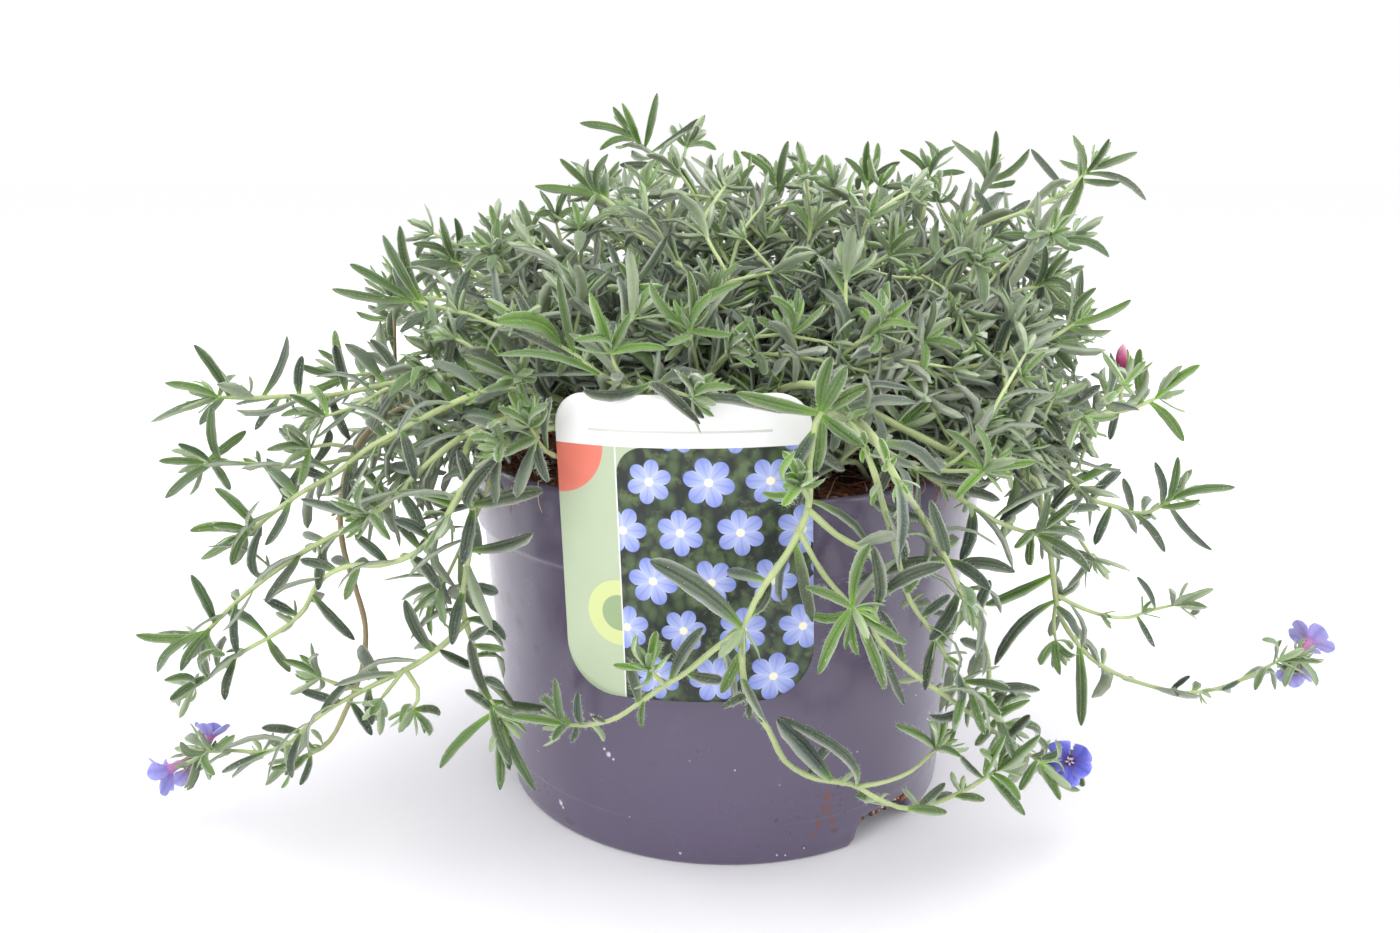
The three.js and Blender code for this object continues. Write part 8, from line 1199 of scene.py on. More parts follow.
{"n": "shoot_front_main", "r": [105, 65], "o": 0, "k": 1, "f": 0, "p": [[20,-910,776],[21,-910,685],[37,-899,597],[85,-900,521],[125,-900,439],[198,-895,391],[285,-881,368],[358,-866,317],[436,-843,278],[521,-814,283],
[602,-778,301],[679,-740,330]],
 "l": [500,103,-909,553,57,6,0,1,60,-69,40,564,110,-885,546,42,22,0,1,49,-73,47,50,-28,-931,630,42,6,35,1,-19,-94,29,173,-26,-940,597,31,25,0,1,32,-63,70,186,39,-929,561,24,6,0,1,8,-73,68,196,68,-911,546,24,6,30,1,24,
-87,44,677,304,-827,306,35,6,20,1,-11,-58,81,714,523,-867,284,39,12,30,1,-14,-57,81,746,526,-817,333,31,6,0,1,-28,-74,62,950,565,-791,395,35,6,0,1,74,-49,47,854,626,-820,288,33,6,20,1,-13,-49,86,990,754,-802,455,39,6,32,
1,-83,-43,35,978,709,-830,294,33,9,55,1,-8,-37,92,966,729,-816,244,39,6,25,1,18,-66,73,954,666,-811,460,33,8,47,1,-57,-80,-19,990,594,-859,446,33,5,48,1,81,7,58,995,725,-693,353,20,3,79,0,-9,-36,93,995,738,-733,341,20,3,
81,0,-21,15,97,995,721,-725,395,20,3,80,0,-82,0,57,120,71,-1032,606,38,5,5,0,41,-20,89,434,249,-784,415,31,7,3,0,46,-38,80,786,563,-742,263,33,7,10,0,29,-8,95]},
{"n": "shoot_front_main", "r": [75, 50], "o": 0, "k": 1, "f": 0, "p": [[296,-879,359],[371,-864,364],[441,-844,385],[498,-820,430]],
 "l": [990,383,-884,525,33,6,40,1,71,-35,60,978,454,-934,558,33,7,56,1,83,28,49,966,571,-712,427,33,3,47,1,28,-21,94,954,533,-936,468,33,6,32,1,-36,22,91,990,516,-821,500,33,4,55,1,-35,-93,10,995,534,-818,479,20,3,86,0,
-77,32,55,995,533,-772,487,20,3,96,0,-9,-73,68,995,554,-806,445,20,3,87,0,-27,0,96]},
{"n": "shoot_front_main", "r": [95, 75], "o": 0, "k": 1, "f": 0, "p": [[141,-889,1015],[198,-914,916],[269,-950,841]],
 "l": [990,151,-1005,916,33,10,42,1,58,-73,36,978,166,-868,805,33,9,60,1,-65,-55,52,966,183,-1020,718,39,10,51,1,0,-87,49,954,290,-881,701,33,5,68,1,37,-87,-32,990,344,-949,646,39,4,41,1,28,-95,11,978,379,-1010,787,39,5,
37,1,-8,-75,65,966,287,-1010,1015,39,5,41,1,-8,-94,-33,995,326,-953,806,20,3,87,0,48,-29,82,995,297,-980,769,20,3,86,0,75,-45,49,995,320,-1002,828,20,3,98,0,29,5,95,120,114,-851,815,35,13,0,0,78,-52,-34]},
{"n": "shoot_front_main", "r": [100, 60], "o": 0, "k": 1, "f": 0, "p": [[162,-882,1057],[234,-891,994],[313,-909,948],[326,-908,861],[320,-889,773],[370,-870,697],[433,-844,633],[502,-819,576],[567,-785,517],[629,-748,
459],[692,-713,399],[757,-674,345],[820,-640,285]],
 "l": [279,302,-943,990,44,4,0,1,-14,-96,-26,262,462,-956,949,48,8,0,1,-54,-76,36,379,399,-909,589,33,-5,0,1,20,-94,28,467,336,-885,814,29,-5,0,1,48,-88,5,654,530,-830,640,37,6,0,1,42,-88,-21,662,477,-827,521,37,6,0,1,
28,-58,77,842,746,-739,476,37,6,0,1,-70,-69,15,842,643,-739,338,37,6,0,1,-20,-76,61,990,856,-696,213,33,4,38,1,5,-82,57,978,734,-745,271,33,7,40,1,16,-39,91,966,804,-768,423,33,8,38,1,96,-16,-24,954,750,-779,443,33,10,
23,1,92,-38,-10,990,946,-588,178,33,5,47,1,64,-62,44,995,860,-605,269,20,3,89,0,34,8,94,995,839,-619,237,20,3,76,0,73,44,52,995,878,-649,261,20,3,89,0,41,34,85,120,341,-1001,1039,43,4,0,0,38,67,64,374,348,-745,632,37,6,
5,0,65,43,62,575,597,-926,520,34,10,0,0,66,21,72,740,720,-612,497,35,13,13,0,23,-37,90,936,745,-610,209,40,12,15,0,60,77,21]},
{"n": "shoot_rim_left", "r": [95, 65], "o": 0, "k": 0, "f": 0, "p": [[-340,-500,1013],[-405,-605,1095],[-450,-676,1142],[-478,-712,1210]],
 "l": [833,-531,-797,1156,39,6,30,1,22,-49,84,817,-473,-712,1100,37,6,0,1,-58,-79,20,800,-427,-788,1092,35,6,0,1,-8,-77,64,990,-530,-817,1272,33,10,48,1,71,6,70,978,-415,-829,1283,33,4,42,1,-82,-2,57,966,-520,-611,1264,
33,8,64,1,-13,-56,82,954,-466,-602,1253,33,9,46,1,-7,-43,90,990,-416,-582,1199,33,3,36,1,31,-7,95,995,-543,-717,1251,20,3,93,0,52,21,83,995,-532,-671,1250,20,3,92,0,28,-47,84,995,-499,-709,1272,20,3,78,0,-91,25,-33,607,
-419,-745,1283,31,8,6,0,-73,-59,-36,820,-568,-764,1186,39,13,23,0,4,20,98]},
{"n": "shoot_rim_left", "r": [80, 55], "o": 0, "k": 1, "f": 0, "p": [[-461,-690,1176],[-484,-737,1163],[-540,-736,1161]],
 "l": [990,-590,-847,1210,33,4,56,1,64,4,77,978,-625,-597,1101,33,6,36,1,-78,-24,58,966,-526,-866,1159,33,3,41,1,-25,-4,97,954,-538,-879,1240,33,6,52,1,-45,44,78,995,-615,-728,1144,20,3,100,0,-22,-1,97,995,-604,-711,
1188,20,3,92,0,21,-39,89,995,-594,-762,1177,20,3,95,0,5,43,90,120,-496,-820,1064,43,4,0,0,-69,-34,64]},
{"n": "shoot_rim_right", "r": [95, 65], "o": 0, "k": 0, "f": 0, "p": [[360,-460,1013],[321,-536,1074],[268,-627,1100],[328,-654,1159],[426,-606,1186]],
 "l": [990,346,-701,1279,33,5,22,1,87,-33,37,978,437,-522,1270,33,6,29,1,7,-71,70,966,482,-613,1250,33,7,44,1,-38,-83,40,954,519,-515,1166,33,8,18,1,49,-43,76,990,438,-487,1095,33,10,20,1,76,32,56,995,464,-568,1217,20,3,
79,0,-18,-50,85,995,482,-581,1185,20,3,93,0,-1,5,100,995,490,-608,1218,20,3,93,0,-40,40,83,200,393,-604,1140,36,11,0,0,-68,14,72,392,151,-648,1007,41,4,0,0,-32,-45,83,572,270,-714,1190,39,13,0,0,47,61,64,772,436,-517,
1157,41,4,3,0,25,-14,96]},
{"n": "shoot_rim_right", "r": [80, 55], "o": 0, "k": 1, "f": 0, "p": [[327,-645,1152],[299,-651,1191],[284,-649,1227]],
 "l": [990,246,-649,1294,33,3,27,1,26,-95,15,978,267,-754,1329,33,5,30,1,-39,68,62,966,309,-785,1302,33,6,32,1,-71,25,66,995,280,-648,1293,20,3,85,0,-99,10,-6,995,255,-667,1276,20,3,84,0,57,61,55,995,247,-624,1282,20,3,
91,0,56,-54,63,120,323,-735,1283,43,13,0,0,-47,72,51]},
{"n": "shoot_back_1", "r": [110, 70], "o": 0, "k": 0, "f": 0, "p": [[-340,300,1013],[-367,317,1116],[-431,361,1195],[-503,410,1263],[-584,464,1318],[-670,521,1359],[-762,579,1382],[-858,635,1389],[-954,690,1379],[-1047,
743,1351]],
 "l": [1000,-1138,788,1371,25,3,65,0,20,-3,98,996,-1147,761,1284,27,4,61,0,-49,29,82,991,-1061,853,1325,30,10,43,0,-51,11,85,987,-1179,710,1390,32,10,47,0,10,55,83,982,-1062,811,1219,35,8,37,0,-68,57,46,978,-1089,823,
1473,37,4,33,0,-57,-77,29,995,-1102,753,1335,20,3,81,0,-23,25,94,995,-1090,801,1324,20,3,82,0,-40,12,91,995,-1108,779,1381,20,3,90,0,30,-20,93,200,-414,483,1216,42,12,0,0,-31,-24,92,278,-525,313,1387,42,12,0,0,-5,91,41,
363,-492,556,1323,40,4,0,0,-45,-18,87,442,-604,517,1435,41,10,0,0,-75,-64,16,524,-793,482,1327,40,6,2,0,-18,29,94,607,-731,695,1449,38,10,4,0,-47,-46,76,670,-851,604,1497,30,6,5,0,71,57,42,747,-930,668,1299,37,4,10,0,
-55,32,77,822,-963,790,1473,41,13,5,0,-31,-62,72,883,-1084,664,1362,37,13,12,0,-18,38,91,957,-1066,839,1306,39,5,17,0,-49,19,85]},
{"n": "shoot_back_1", "r": [80, 55], "o": 0, "k": 1, "f": 0, "p": [[-552,443,1294],[-619,469,1339],[-693,469,1384],[-765,439,1426],[-826,391,1464],[-880,335,1498]],
 "l": [1000,-915,249,1555,25,7,55,0,-7,57,82,990,-988,273,1514,27,3,46,0,19,-5,98,980,-920,277,1562,29,7,53,0,25,61,75,969,-902,220,1494,31,6,51,0,-23,7,97,959,-984,349,1545,33,9,34,0,37,-43,82,949,-835,267,1603,35,6,28,
0,-85,28,44,939,-962,266,1400,37,8,13,0,-39,-40,83,995,-931,309,1522,20,3,84,0,43,1,90,995,-905,272,1508,20,3,91,0,-12,22,97,150,-738,407,1298,33,12,0,0,-29,17,94,323,-727,572,1444,41,9,0,0,-12,-66,74,464,-788,356,1407,
39,10,2,0,-17,20,96,614,-896,352,1392,41,9,12,0,-20,-12,97,762,-898,407,1575,42,12,9,0,49,-78,39,872,-849,272,1523,31,12,7,0,-38,40,83]},
{"n": "shoot_back_1", "r": [80, 55], "o": 0, "k": 1, "f": 0, "p": [[-708,544,1365],[-767,602,1390],[-806,675,1407],[-819,759,1421],[-812,844,1431],[-795,928,1440]],
 "l": [1000,-784,1029,1500,25,7,69,0,5,-52,86,990,-800,1031,1414,27,6,50,0,13,23,96,980,-739,993,1498,30,6,50,0,-65,-10,75,969,-871,1018,1469,32,4,36,0,50,10,86,959,-719,1007,1342,35,10,40,0,19,61,77,949,-743,957,1601,
37,6,15,0,-59,81,-4,995,-810,995,1447,20,3,77,0,28,-6,96,995,-752,994,1426,20,3,80,0,-8,24,97,150,-829,554,1468,42,12,0,0,21,83,51,306,-817,771,1333,36,11,0,0,-23,41,89,458,-795,798,1531,40,10,7,0,-78,-42,46,582,-901,
843,1407,40,10,2,0,19,30,93,698,-703,921,1440,38,6,2,0,-32,20,93,832,-873,976,1522,32,13,17,0,71,-14,69]},
{"n": "shoot_back_2", "r": [110, 70], "o": 0, "k": 0, "f": 0, "p": [[-220,400,1013],[-231,421,1120],[-267,499,1189],[-311,594,1229],[-357,694,1254],[-404,796,1259],[-455,896,1244],[-510,988,1208],[-562,1071,1153],[-609,
1144,1081],[-650,1202,994],[-680,1245,894],[-700,1272,786]],
 "l": [1000,-678,1284,670,25,8,60,0,-23,97,6,997,-744,1356,709,27,2,39,0,-36,54,76,990,-658,1311,704,32,6,39,0,-1,92,40,987,-838,1315,759,35,4,31,0,-18,34,92,984,-782,1146,775,37,8,25,0,-48,11,87,995,-732,1305,732,20,3,
81,0,-49,61,62,995,-714,1257,733,20,3,85,0,-92,36,16,995,-677,1281,720,20,3,77,0,-3,99,13,200,-427,563,1306,38,4,0,0,57,42,71,260,-303,734,1160,41,10,0,0,-19,50,84,328,-398,743,1371,40,3,0,0,-27,83,-50,391,-528,796,1194,
33,9,0,0,-28,51,81,455,-368,960,1252,31,10,2,0,-44,24,86,519,-577,977,1318,39,10,0,0,67,37,64,570,-551,1031,1101,42,12,2,0,-46,70,55,617,-542,1193,1236,36,10,6,0,-46,-27,85,664,-692,1064,1081,37,5,1,0,-43,56,71,716,-509,
1209,1016,37,12,9,0,-21,78,58,759,-734,1243,1101,40,4,5,0,33,15,93,808,-652,1165,863,39,8,10,0,-71,70,-3,848,-643,1331,921,33,12,13,0,-38,42,83,891,-786,1216,853,36,10,15,0,-53,46,71,932,-798,1216,773,35,5,4,0,-68,35,
64]},
{"n": "shoot_back_2", "r": [80, 55], "o": 0, "k": 1, "f": 0, "p": [[-366,715,1253],[-387,797,1276],[-381,875,1310],[-349,941,1356],[-301,994,1406],[-248,1040,1457]],
 "l": [1000,-212,1113,1520,25,5,67,0,-2,-65,76,990,-149,1057,1474,27,6,49,0,-22,17,96,980,-230,1081,1553,28,5,57,0,39,-87,31,970,-228,1146,1456,30,10,46,0,21,-11,97,960,-159,1004,1529,32,7,31,0,-43,57,70,949,-288,1119,
1546,34,9,21,0,69,-45,57,939,-115,1092,1406,35,5,30,0,15,18,97,929,-243,969,1601,37,7,16,0,30,92,26,995,-187,1077,1490,20,3,95,0,-41,-15,90,995,-207,1047,1516,20,3,89,0,-78,39,49,995,-235,1092,1497,20,3,81,0,20,-63,75,
150,-515,826,1318,34,6,6,0,43,35,83,350,-322,962,1288,31,9,0,0,-8,17,98,535,-330,933,1474,37,13,7,0,-13,99,-6,654,-314,1083,1396,31,7,3,0,17,-23,96,764,-171,977,1491,38,8,13,0,-49,42,76,890,-288,1104,1527,39,8,13,0,60,
-56,57]},
{"n": "shoot_back_2", "r": [80, 55], "o": 0, "k": 1, "f": 0, "p": [[-455,896,1244],[-509,957,1229],[-579,997,1223],[-660,1011,1225],[-742,1007,1233],[-822,994,1244]],
 "l": [1000,-901,997,1289,25,8,60,0,48,-24,85,989,-897,939,1244,27,8,49,0,-14,21,97,979,-929,1035,1240,28,6,58,0,-11,-25,96,968,-884,981,1328,30,2,42,0,71,26,66,957,-912,937,1180,32,2,25,0,-47,-6,88,946,-896,1079,1312,
34,4,38,0,-6,-69,72,936,-851,868,1309,35,6,25,0,-38,55,75,925,-906,1060,1131,37,9,25,0,-69,0,72,995,-888,963,1263,20,3,87,0,14,28,95,995,-899,1012,1239,20,3,91,0,-10,-20,98,995,-884,995,1299,20,3,80,0,62,-30,72,150,-611,
911,1232,32,7,5,0,-15,52,84,361,-613,1088,1146,30,5,0,0,-57,32,76,501,-689,1031,1332,37,10,2,0,-84,6,-55,628,-797,919,1165,42,3,4,0,-47,6,88,776,-832,1074,1272,31,5,15,0,-1,-52,85]},
{"n": "shoot_back_3", "r": [110, 70], "o": 0, "k": 0, "f": 0, "p": [[-80,440,1013],[-86,470,1114],[-105,545,1191],[-127,628,1258],[-149,719,1312],[-170,819,1352],[-188,924,1375],[-200,1032,1382],[-210,1140,1372],[-220,
1245,1344]],
 "l": [1000,-249,1323,1308,25,4,46,0,2,43,90,996,-171,1352,1338,27,4,46,0,-29,19,94,991,-288,1335,1376,30,8,54,0,48,7,87,987,-204,1302,1243,32,9,44,0,-2,83,55,982,-170,1337,1438,35,6,32,0,-81,-11,58,978,-381,1277,1304,
37,8,32,0,-3,60,80,995,-204,1317,1318,20,3,92,0,-12,35,93,995,-234,1301,1357,20,3,82,0,17,-15,98,995,-258,1291,1343,20,3,78,0,27,26,93,200,-120,516,1311,41,5,0,0,13,99,11,304,-240,630,1284,43,6,0,0,38,29,88,403,-67,766,
1385,35,11,0,0,-75,-6,66,483,-296,830,1351,43,8,0,0,29,25,92,552,-164,947,1304,39,8,3,0,-9,34,94,622,-162,979,1507,35,4,1,0,-88,-32,34,695,-307,1073,1361,34,12,5,0,18,30,94,772,-107,1152,1364,39,12,5,0,-25,32,91,838,
-297,1206,1445,41,10,8,0,62,3,79,890,-181,1246,1260,43,7,10,0,-2,73,68]},
{"n": "shoot_back_3", "r": [80, 55], "o": 0, "k": 1, "f": 0, "p": [[-140,684,1288],[-169,750,1341],[-212,805,1394],[-270,840,1451],[-335,858,1507],[-404,866,1562]],
 "l": [1000,-489,861,1604,25,5,63,0,43,11,89,990,-414,920,1645,27,4,49,0,-44,-79,43,970,-516,914,1576,30,4,33,0,11,-16,98,960,-375,880,1668,32,4,47,0,-97,-17,15,950,-513,772,1580,34,4,21,0,0,32,95,940,-455,1003,1599,35,
7,22,0,-16,-42,89,930,-373,779,1696,37,8,27,0,-61,68,40,995,-440,906,1607,20,3,95,0,13,-69,71,995,-451,845,1606,20,3,83,0,45,51,73,150,-274,807,1298,36,9,0,0,-7,28,96,286,-120,872,1427,41,9,0,0,-58,-14,80,447,-304,742,
1527,39,12,6,0,14,80,58,598,-395,907,1428,36,7,7,0,-15,5,99,718,-315,923,1631,30,7,3,0,-66,-69,30,844,-455,783,1590,31,4,14,0,17,53,83]},
{"n": "shoot_back_3", "r": [80, 55], "o": 0, "k": 1, "f": 0, "p": [[-177,862,1359],[-169,957,1380],[-114,1037,1383],[-34,1094,1375],[54,1136,1363]],
 "l": [1000,122,1204,1362,25,7,61,0,17,-17,97,989,148,1139,1331,27,6,48,0,30,24,92,978,129,1176,1424,29,4,42,0,-43,-33,84,966,101,1216,1298,31,9,47,0,54,25,80,955,168,1073,1389,33,10,44,0,7,52,85,944,60,1244,1433,35,8,
18,0,56,-50,66,933,106,1110,1216,37,8,35,0,88,23,42,995,113,1182,1380,20,3,85,0,-5,-28,96,995,114,1174,1330,20,3,81,0,39,15,91,995,119,1131,1372,20,3,85,0,-10,37,92,150,-241,1032,1451,38,7,0,0,64,-15,76,326,-74,1048,
1314,39,5,3,0,30,48,82,466,-48,1061,1514,36,10,0,0,-43,90,1,606,-59,1187,1353,34,10,5,0,43,12,89,779,107,1052,1340,31,5,9,0,35,34,87]},
{"n": "shoot_back_4", "r": [110, 70], "o": 0, "k": 0, "f": 0, "p": [[60,460,1013],[62,481,1117],[75,557,1191],[95,656,1234],[117,759,1262],[139,866,1272],[159,973,1263],[175,1078,1234],[185,1176,1186],[191,1264,1122],
[194,1339,1042],[195,1397,949],[194,1436,847],[195,1457,739]],
 "l": [988,179,1571,757,35,4,29,0,5,0,100,200,106,765,1107,31,4,0,0,11,59,80,255,204,723,1372,33,12,0,0,-73,51,44,316,24,883,1323,32,11,3,0,60,9,80,383,225,949,1161,37,8,0,0,23,68,70,438,177,1027,1399,34,7,0,0,13,82,-56,
488,113,1117,1142,42,8,4,0,4,73,68,550,291,1195,1276,40,5,1,0,-57,27,78,605,86,1318,1194,42,8,1,0,39,25,89,655,253,1270,1028,32,3,5,0,24,86,45,695,229,1413,1135,31,3,5,0,-21,-5,98,737,85,1360,977,33,4,3,0,-18,79,59,788,
298,1393,934,42,6,10,0,23,75,62,828,137,1538,919,41,4,10,0,11,36,93,878,118,1524,821,35,6,11,0,-4,60,80,923,279,1470,772,35,9,18,0,35,64,68,969,197,1589,731,42,4,18,0,1,35,94]},
{"n": "shoot_back_4", "r": [80, 55], "o": 0, "k": 1, "f": 0, "p": [[129,818,1266],[127,905,1287],[89,977,1319],[26,1026,1358],[-47,1055,1398],[-123,1078,1439]],
 "l": [1000,-176,1119,1500,25,4,70,0,30,-65,70,990,-228,1045,1457,27,5,60,0,9,30,95,980,-203,1141,1450,28,7,42,0,1,-21,98,970,-162,1094,1568,30,3,48,0,-90,23,-37,960,-253,1038,1432,32,5,31,0,-5,22,97,950,-127,1189,1505,
34,8,35,0,-38,-56,73,940,-156,997,1544,35,4,27,0,-16,86,48,931,-226,1099,1371,37,6,12,0,-36,11,93,995,-174,1074,1472,20,3,93,0,50,29,81,995,-153,1106,1497,20,3,96,0,8,-88,47,150,29,959,1317,33,4,2,0,45,21,87,304,131,
1094,1287,42,10,4,0,-26,13,96,486,37,1013,1479,40,9,2,0,-62,76,-18,633,-118,1037,1360,30,10,10,0,-3,18,98,771,-54,1154,1458,34,9,13,0,-39,-55,74,898,-156,992,1435,38,7,3,0,-17,38,91]},
{"n": "shoot_back_4", "r": [80, 55], "o": 0, "k": 1, "f": 0, "p": [[168,1026,1251],[202,1114,1232],[270,1182,1228],[356,1226,1236],[448,1253,1251]],
 "l": [1000,567,1259,1251,25,4,54,0,-1,13,99,989,535,1273,1330,27,4,54,0,-65,-9,76,977,522,1317,1237,28,2,43,0,22,-10,97,966,555,1196,1282,30,2,48,0,-5,46,89,955,493,1349,1316,32,9,48,0,23,-64,74,943,550,1266,1158,34,3,
40,0,56,14,81,932,502,1191,1374,35,3,16,0,11,94,33,920,459,1412,1250,37,7,27,0,45,-13,88,995,505,1251,1277,20,3,96,0,-40,25,88,150,303,1131,1279,35,7,0,0,-46,42,78,357,238,1280,1265,36,6,0,0,45,-27,85,560,408,1224,1164,
41,6,11,0,41,26,87,715,456,1206,1355,30,11,3,0,-42,77,48,850,463,1391,1237,38,6,12,0,38,-15,91]},
{"n": "shoot_back_5", "r": [110, 70], "o": 0, "k": 0, "f": 0, "p": [[200,420,1013],[216,448,1116],[258,517,1191],[305,595,1255],[356,680,1305],[408,773,1338],[459,871,1355],[507,970,1353],[553,1070,1334],[596,1165,
1297]],
 "l": [1000,659,1228,1263,25,7,51,0,8,41,91,996,623,1282,1327,27,10,39,0,14,-26,96,991,599,1233,1210,30,7,52,0,28,73,63,987,705,1210,1326,32,8,46,0,-37,39,84,982,517,1289,1319,35,5,28,0,54,19,82,978,674,1137,1180,37,6,
18,0,65,64,41,995,607,1233,1261,20,3,86,0,24,42,88,995,649,1207,1273,20,3,82,0,7,43,90,995,610,1223,1315,20,3,78,0,11,-28,95,200,298,670,1184,33,6,0,0,8,-6,99,278,378,521,1327,31,8,0,0,-40,69,61,347,241,725,1329,42,5,0,
0,57,-12,82,426,469,747,1266,36,13,2,0,7,27,96,497,450,778,1488,40,8,3,0,-75,66,10,566,389,886,1414,39,11,1,0,63,-34,70,627,618,881,1381,31,3,6,0,-25,39,89,711,465,1034,1425,40,6,5,0,55,-36,75,773,589,1066,1243,35,9,9,0,
30,59,75,836,623,1087,1428,33,6,13,0,-75,29,60,890,492,1196,1315,33,5,7,0,39,32,86,953,678,1149,1232,34,10,16,0,41,62,67]},
{"n": "shoot_back_5", "r": [80, 55], "o": 0, "k": 1, "f": 0, "p": [[336,647,1282],[385,701,1326],[446,741,1368],[517,758,1410],[592,757,1449],[667,747,1487]],
 "l": [1000,740,764,1537,25,6,52,0,-45,-40,80,990,766,700,1505,27,2,42,0,-10,20,98,979,725,763,1596,29,8,41,0,-34,-88,32,969,778,796,1488,31,6,36,0,3,-24,97,958,717,635,1532,33,3,39,0,18,50,85,948,696,826,1600,35,7,35,0,
27,-86,43,938,778,719,1392,37,9,15,0,51,-9,85,995,707,740,1535,20,3,92,0,-74,14,66,995,740,764,1512,20,3,80,0,-27,-27,92,995,717,713,1507,20,3,91,0,-14,37,92,150,351,785,1407,34,6,3,0,65,-44,62,352,583,680,1373,39,5,3,0,
2,33,95,540,511,807,1519,41,4,6,0,69,-69,21,683,670,787,1423,32,8,8,0,5,-9,99,816,651,657,1540,35,7,11,0,21,70,68]},
{"n": "shoot_back_5", "r": [80, 55], "o": 0, "k": 1, "f": 0, "p": [[405,769,1333],[427,862,1357],[400,954,1368],[342,1033,1370],[271,1101,1368]],
 "l": [1000,220,1174,1402,25,3,67,0,2,-40,92,989,179,1100,1362,27,5,44,0,-5,40,92,978,242,1206,1342,29,5,56,0,-34,11,93,966,189,1146,1470,31,3,40,0,76,8,64,955,164,1116,1277,33,10,32,0,-50,40,77,944,302,1221,1421,35,2,
26,0,-60,-23,77,933,142,1034,1447,37,4,31,0,14,70,70,995,233,1147,1379,20,3,80,0,2,-19,98,995,202,1123,1380,20,3,87,0,23,23,95,995,237,1151,1343,20,3,90,0,-32,24,92,150,450,878,1270,37,5,0,0,25,76,60,340,336,971,1474,43,
8,0,0,84,19,51,531,321,1045,1303,42,10,0,0,-26,46,85,708,352,1180,1430,42,8,8,0,-49,-31,81,867,227,1074,1463,30,10,13,0,49,79,36]},
{"n": "shoot_back_6", "r": [110, 70], "o": 0, "k": 0, "f": 0, "p": [[340,340,1013],[356,356,1116],[415,412,1184],[487,481,1227],[562,554,1255],[640,629,1263],[718,704,1252],[793,776,1222],[863,843,1172],[924,903,1106],
[975,953,1024],[1014,990,930],[1040,1015,827]],
 "l": [1000,1104,1037,745,25,4,49,0,64,46,62,997,1023,1077,742,27,5,57,0,33,80,50,993,1066,965,736,29,3,38,0,96,0,28,990,1120,1108,782,31,5,37,0,30,28,91,986,941,1020,730,33,3,39,0,-43,80,42,983,1172,949,785,35,7,38,0,
50,28,82,980,1013,1175,822,37,5,20,0,37,21,91,995,1030,1026,751,20,3,94,0,50,86,8,995,1081,1005,768,20,3,79,0,80,34,49,995,1064,1069,784,20,3,82,0,42,48,77,200,563,422,1323,42,3,1,0,-48,67,57,274,504,653,1312,34,12,0,0,
49,-38,79,341,683,592,1195,39,9,0,0,37,35,86,408,726,679,1364,34,12,0,0,-74,4,67,463,689,831,1221,35,8,4,0,42,20,88,529,848,703,1160,31,4,0,0,64,39,66,579,840,897,1267,35,5,5,0,28,-42,86,634,887,809,1061,34,4,5,0,81,51,
28,695,1013,898,1183,40,11,7,0,-32,42,85,758,915,1047,995,36,11,10,0,47,56,68,800,1079,891,946,41,8,2,0,69,41,60,845,1082,1093,975,35,10,14,0,22,10,97,896,967,986,836,42,8,6,0,32,95,-8,950,1100,916,797,31,8,13,0,79,2,
62]},
{"n": "shoot_back_6", "r": [80, 55], "o": 0, "k": 1, "f": 0, "p": [[578,569,1254],[629,641,1281],[653,719,1318],[647,796,1365],[620,866,1416],[584,932,1468]],
 "l": [1000,520,980,1539,25,4,62,0,69,-13,71,990,559,1041,1503,27,2,49,0,-5,-33,94,981,553,948,1560,29,9,48,0,78,61,13,971,485,984,1484,31,2,45,0,27,9,96,961,655,1041,1527,33,8,29,0,-54,-19,82,952,512,892,1585,35,2,26,0,
44,79,42,942,526,1052,1391,37,4,22,0,-18,32,93,995,550,975,1496,20,3,95,0,36,-29,89,995,592,976,1518,20,3,88,0,-57,-58,58,150,670,758,1190,39,4,0,0,27,43,86,327,677,681,1429,35,7,6,0,-18,98,12,487,538,815,1436,42,8,5,0,
69,17,71,613,661,933,1353,31,6,5,0,-13,13,98,740,627,860,1535,37,10,11,0,-48,87,-10,853,498,946,1460,40,10,15,0,31,10,95]},
{"n": "shoot_back_6", "r": [80, 55], "o": 0, "k": 1, "f": 0, "p": [[718,704,1252],[803,751,1238],[900,750,1236],[992,716,1242],[1076,666,1252]],
 "l": [1000,1167,645,1290,25,10,54,0,-41,-17,90,989,1159,595,1229,27,3,60,0,21,-7,98,978,1120,615,1327,28,3,45,0,-4,79,61,966,1209,682,1244,30,8,46,0,6,-33,94,955,1101,536,1247,32,3,38,0,37,8,92,944,1152,681,1372,34,8,
34,0,-37,-87,32,933,1155,653,1150,35,3,16,0,62,-33,72,922,1042,558,1348,37,6,22,0,70,41,58,995,1134,637,1247,20,3,85,0,5,-8,100,995,1109,618,1273,20,3,85,0,8,43,90,995,1144,658,1274,20,3,81,0,-31,-26,91,150,796,883,1239,
33,8,2,0,48,-7,87,317,931,648,1215,38,8,3,0,41,22,88,508,1002,795,1335,35,7,4,0,-13,-85,51,649,1063,692,1138,36,3,5,0,61,-25,75,782,1047,599,1291,39,8,4,0,33,48,81]},
{"n": "shoot_back_7", "r": [110, 70], "o": 0, "k": 0, "f": 0, "p": [[420,180,1013],[449,195,1109],[512,229,1186],[582,267,1254],[661,307,1310],[749,346,1352],[844,382,1379],[943,417,1390],[1042,452,1384]],
 "l": [1000,1136,505,1423,25,8,45,0,-21,-31,93,995,1141,501,1335,27,3,47,0,38,11,92,990,1149,425,1421,28,5,48,0,-18,46,87,984,1093,546,1403,30,3,35,0,29,-34,89,979,1129,420,1322,32,10,46,0,54,19,82,974,1117,472,1508,34,
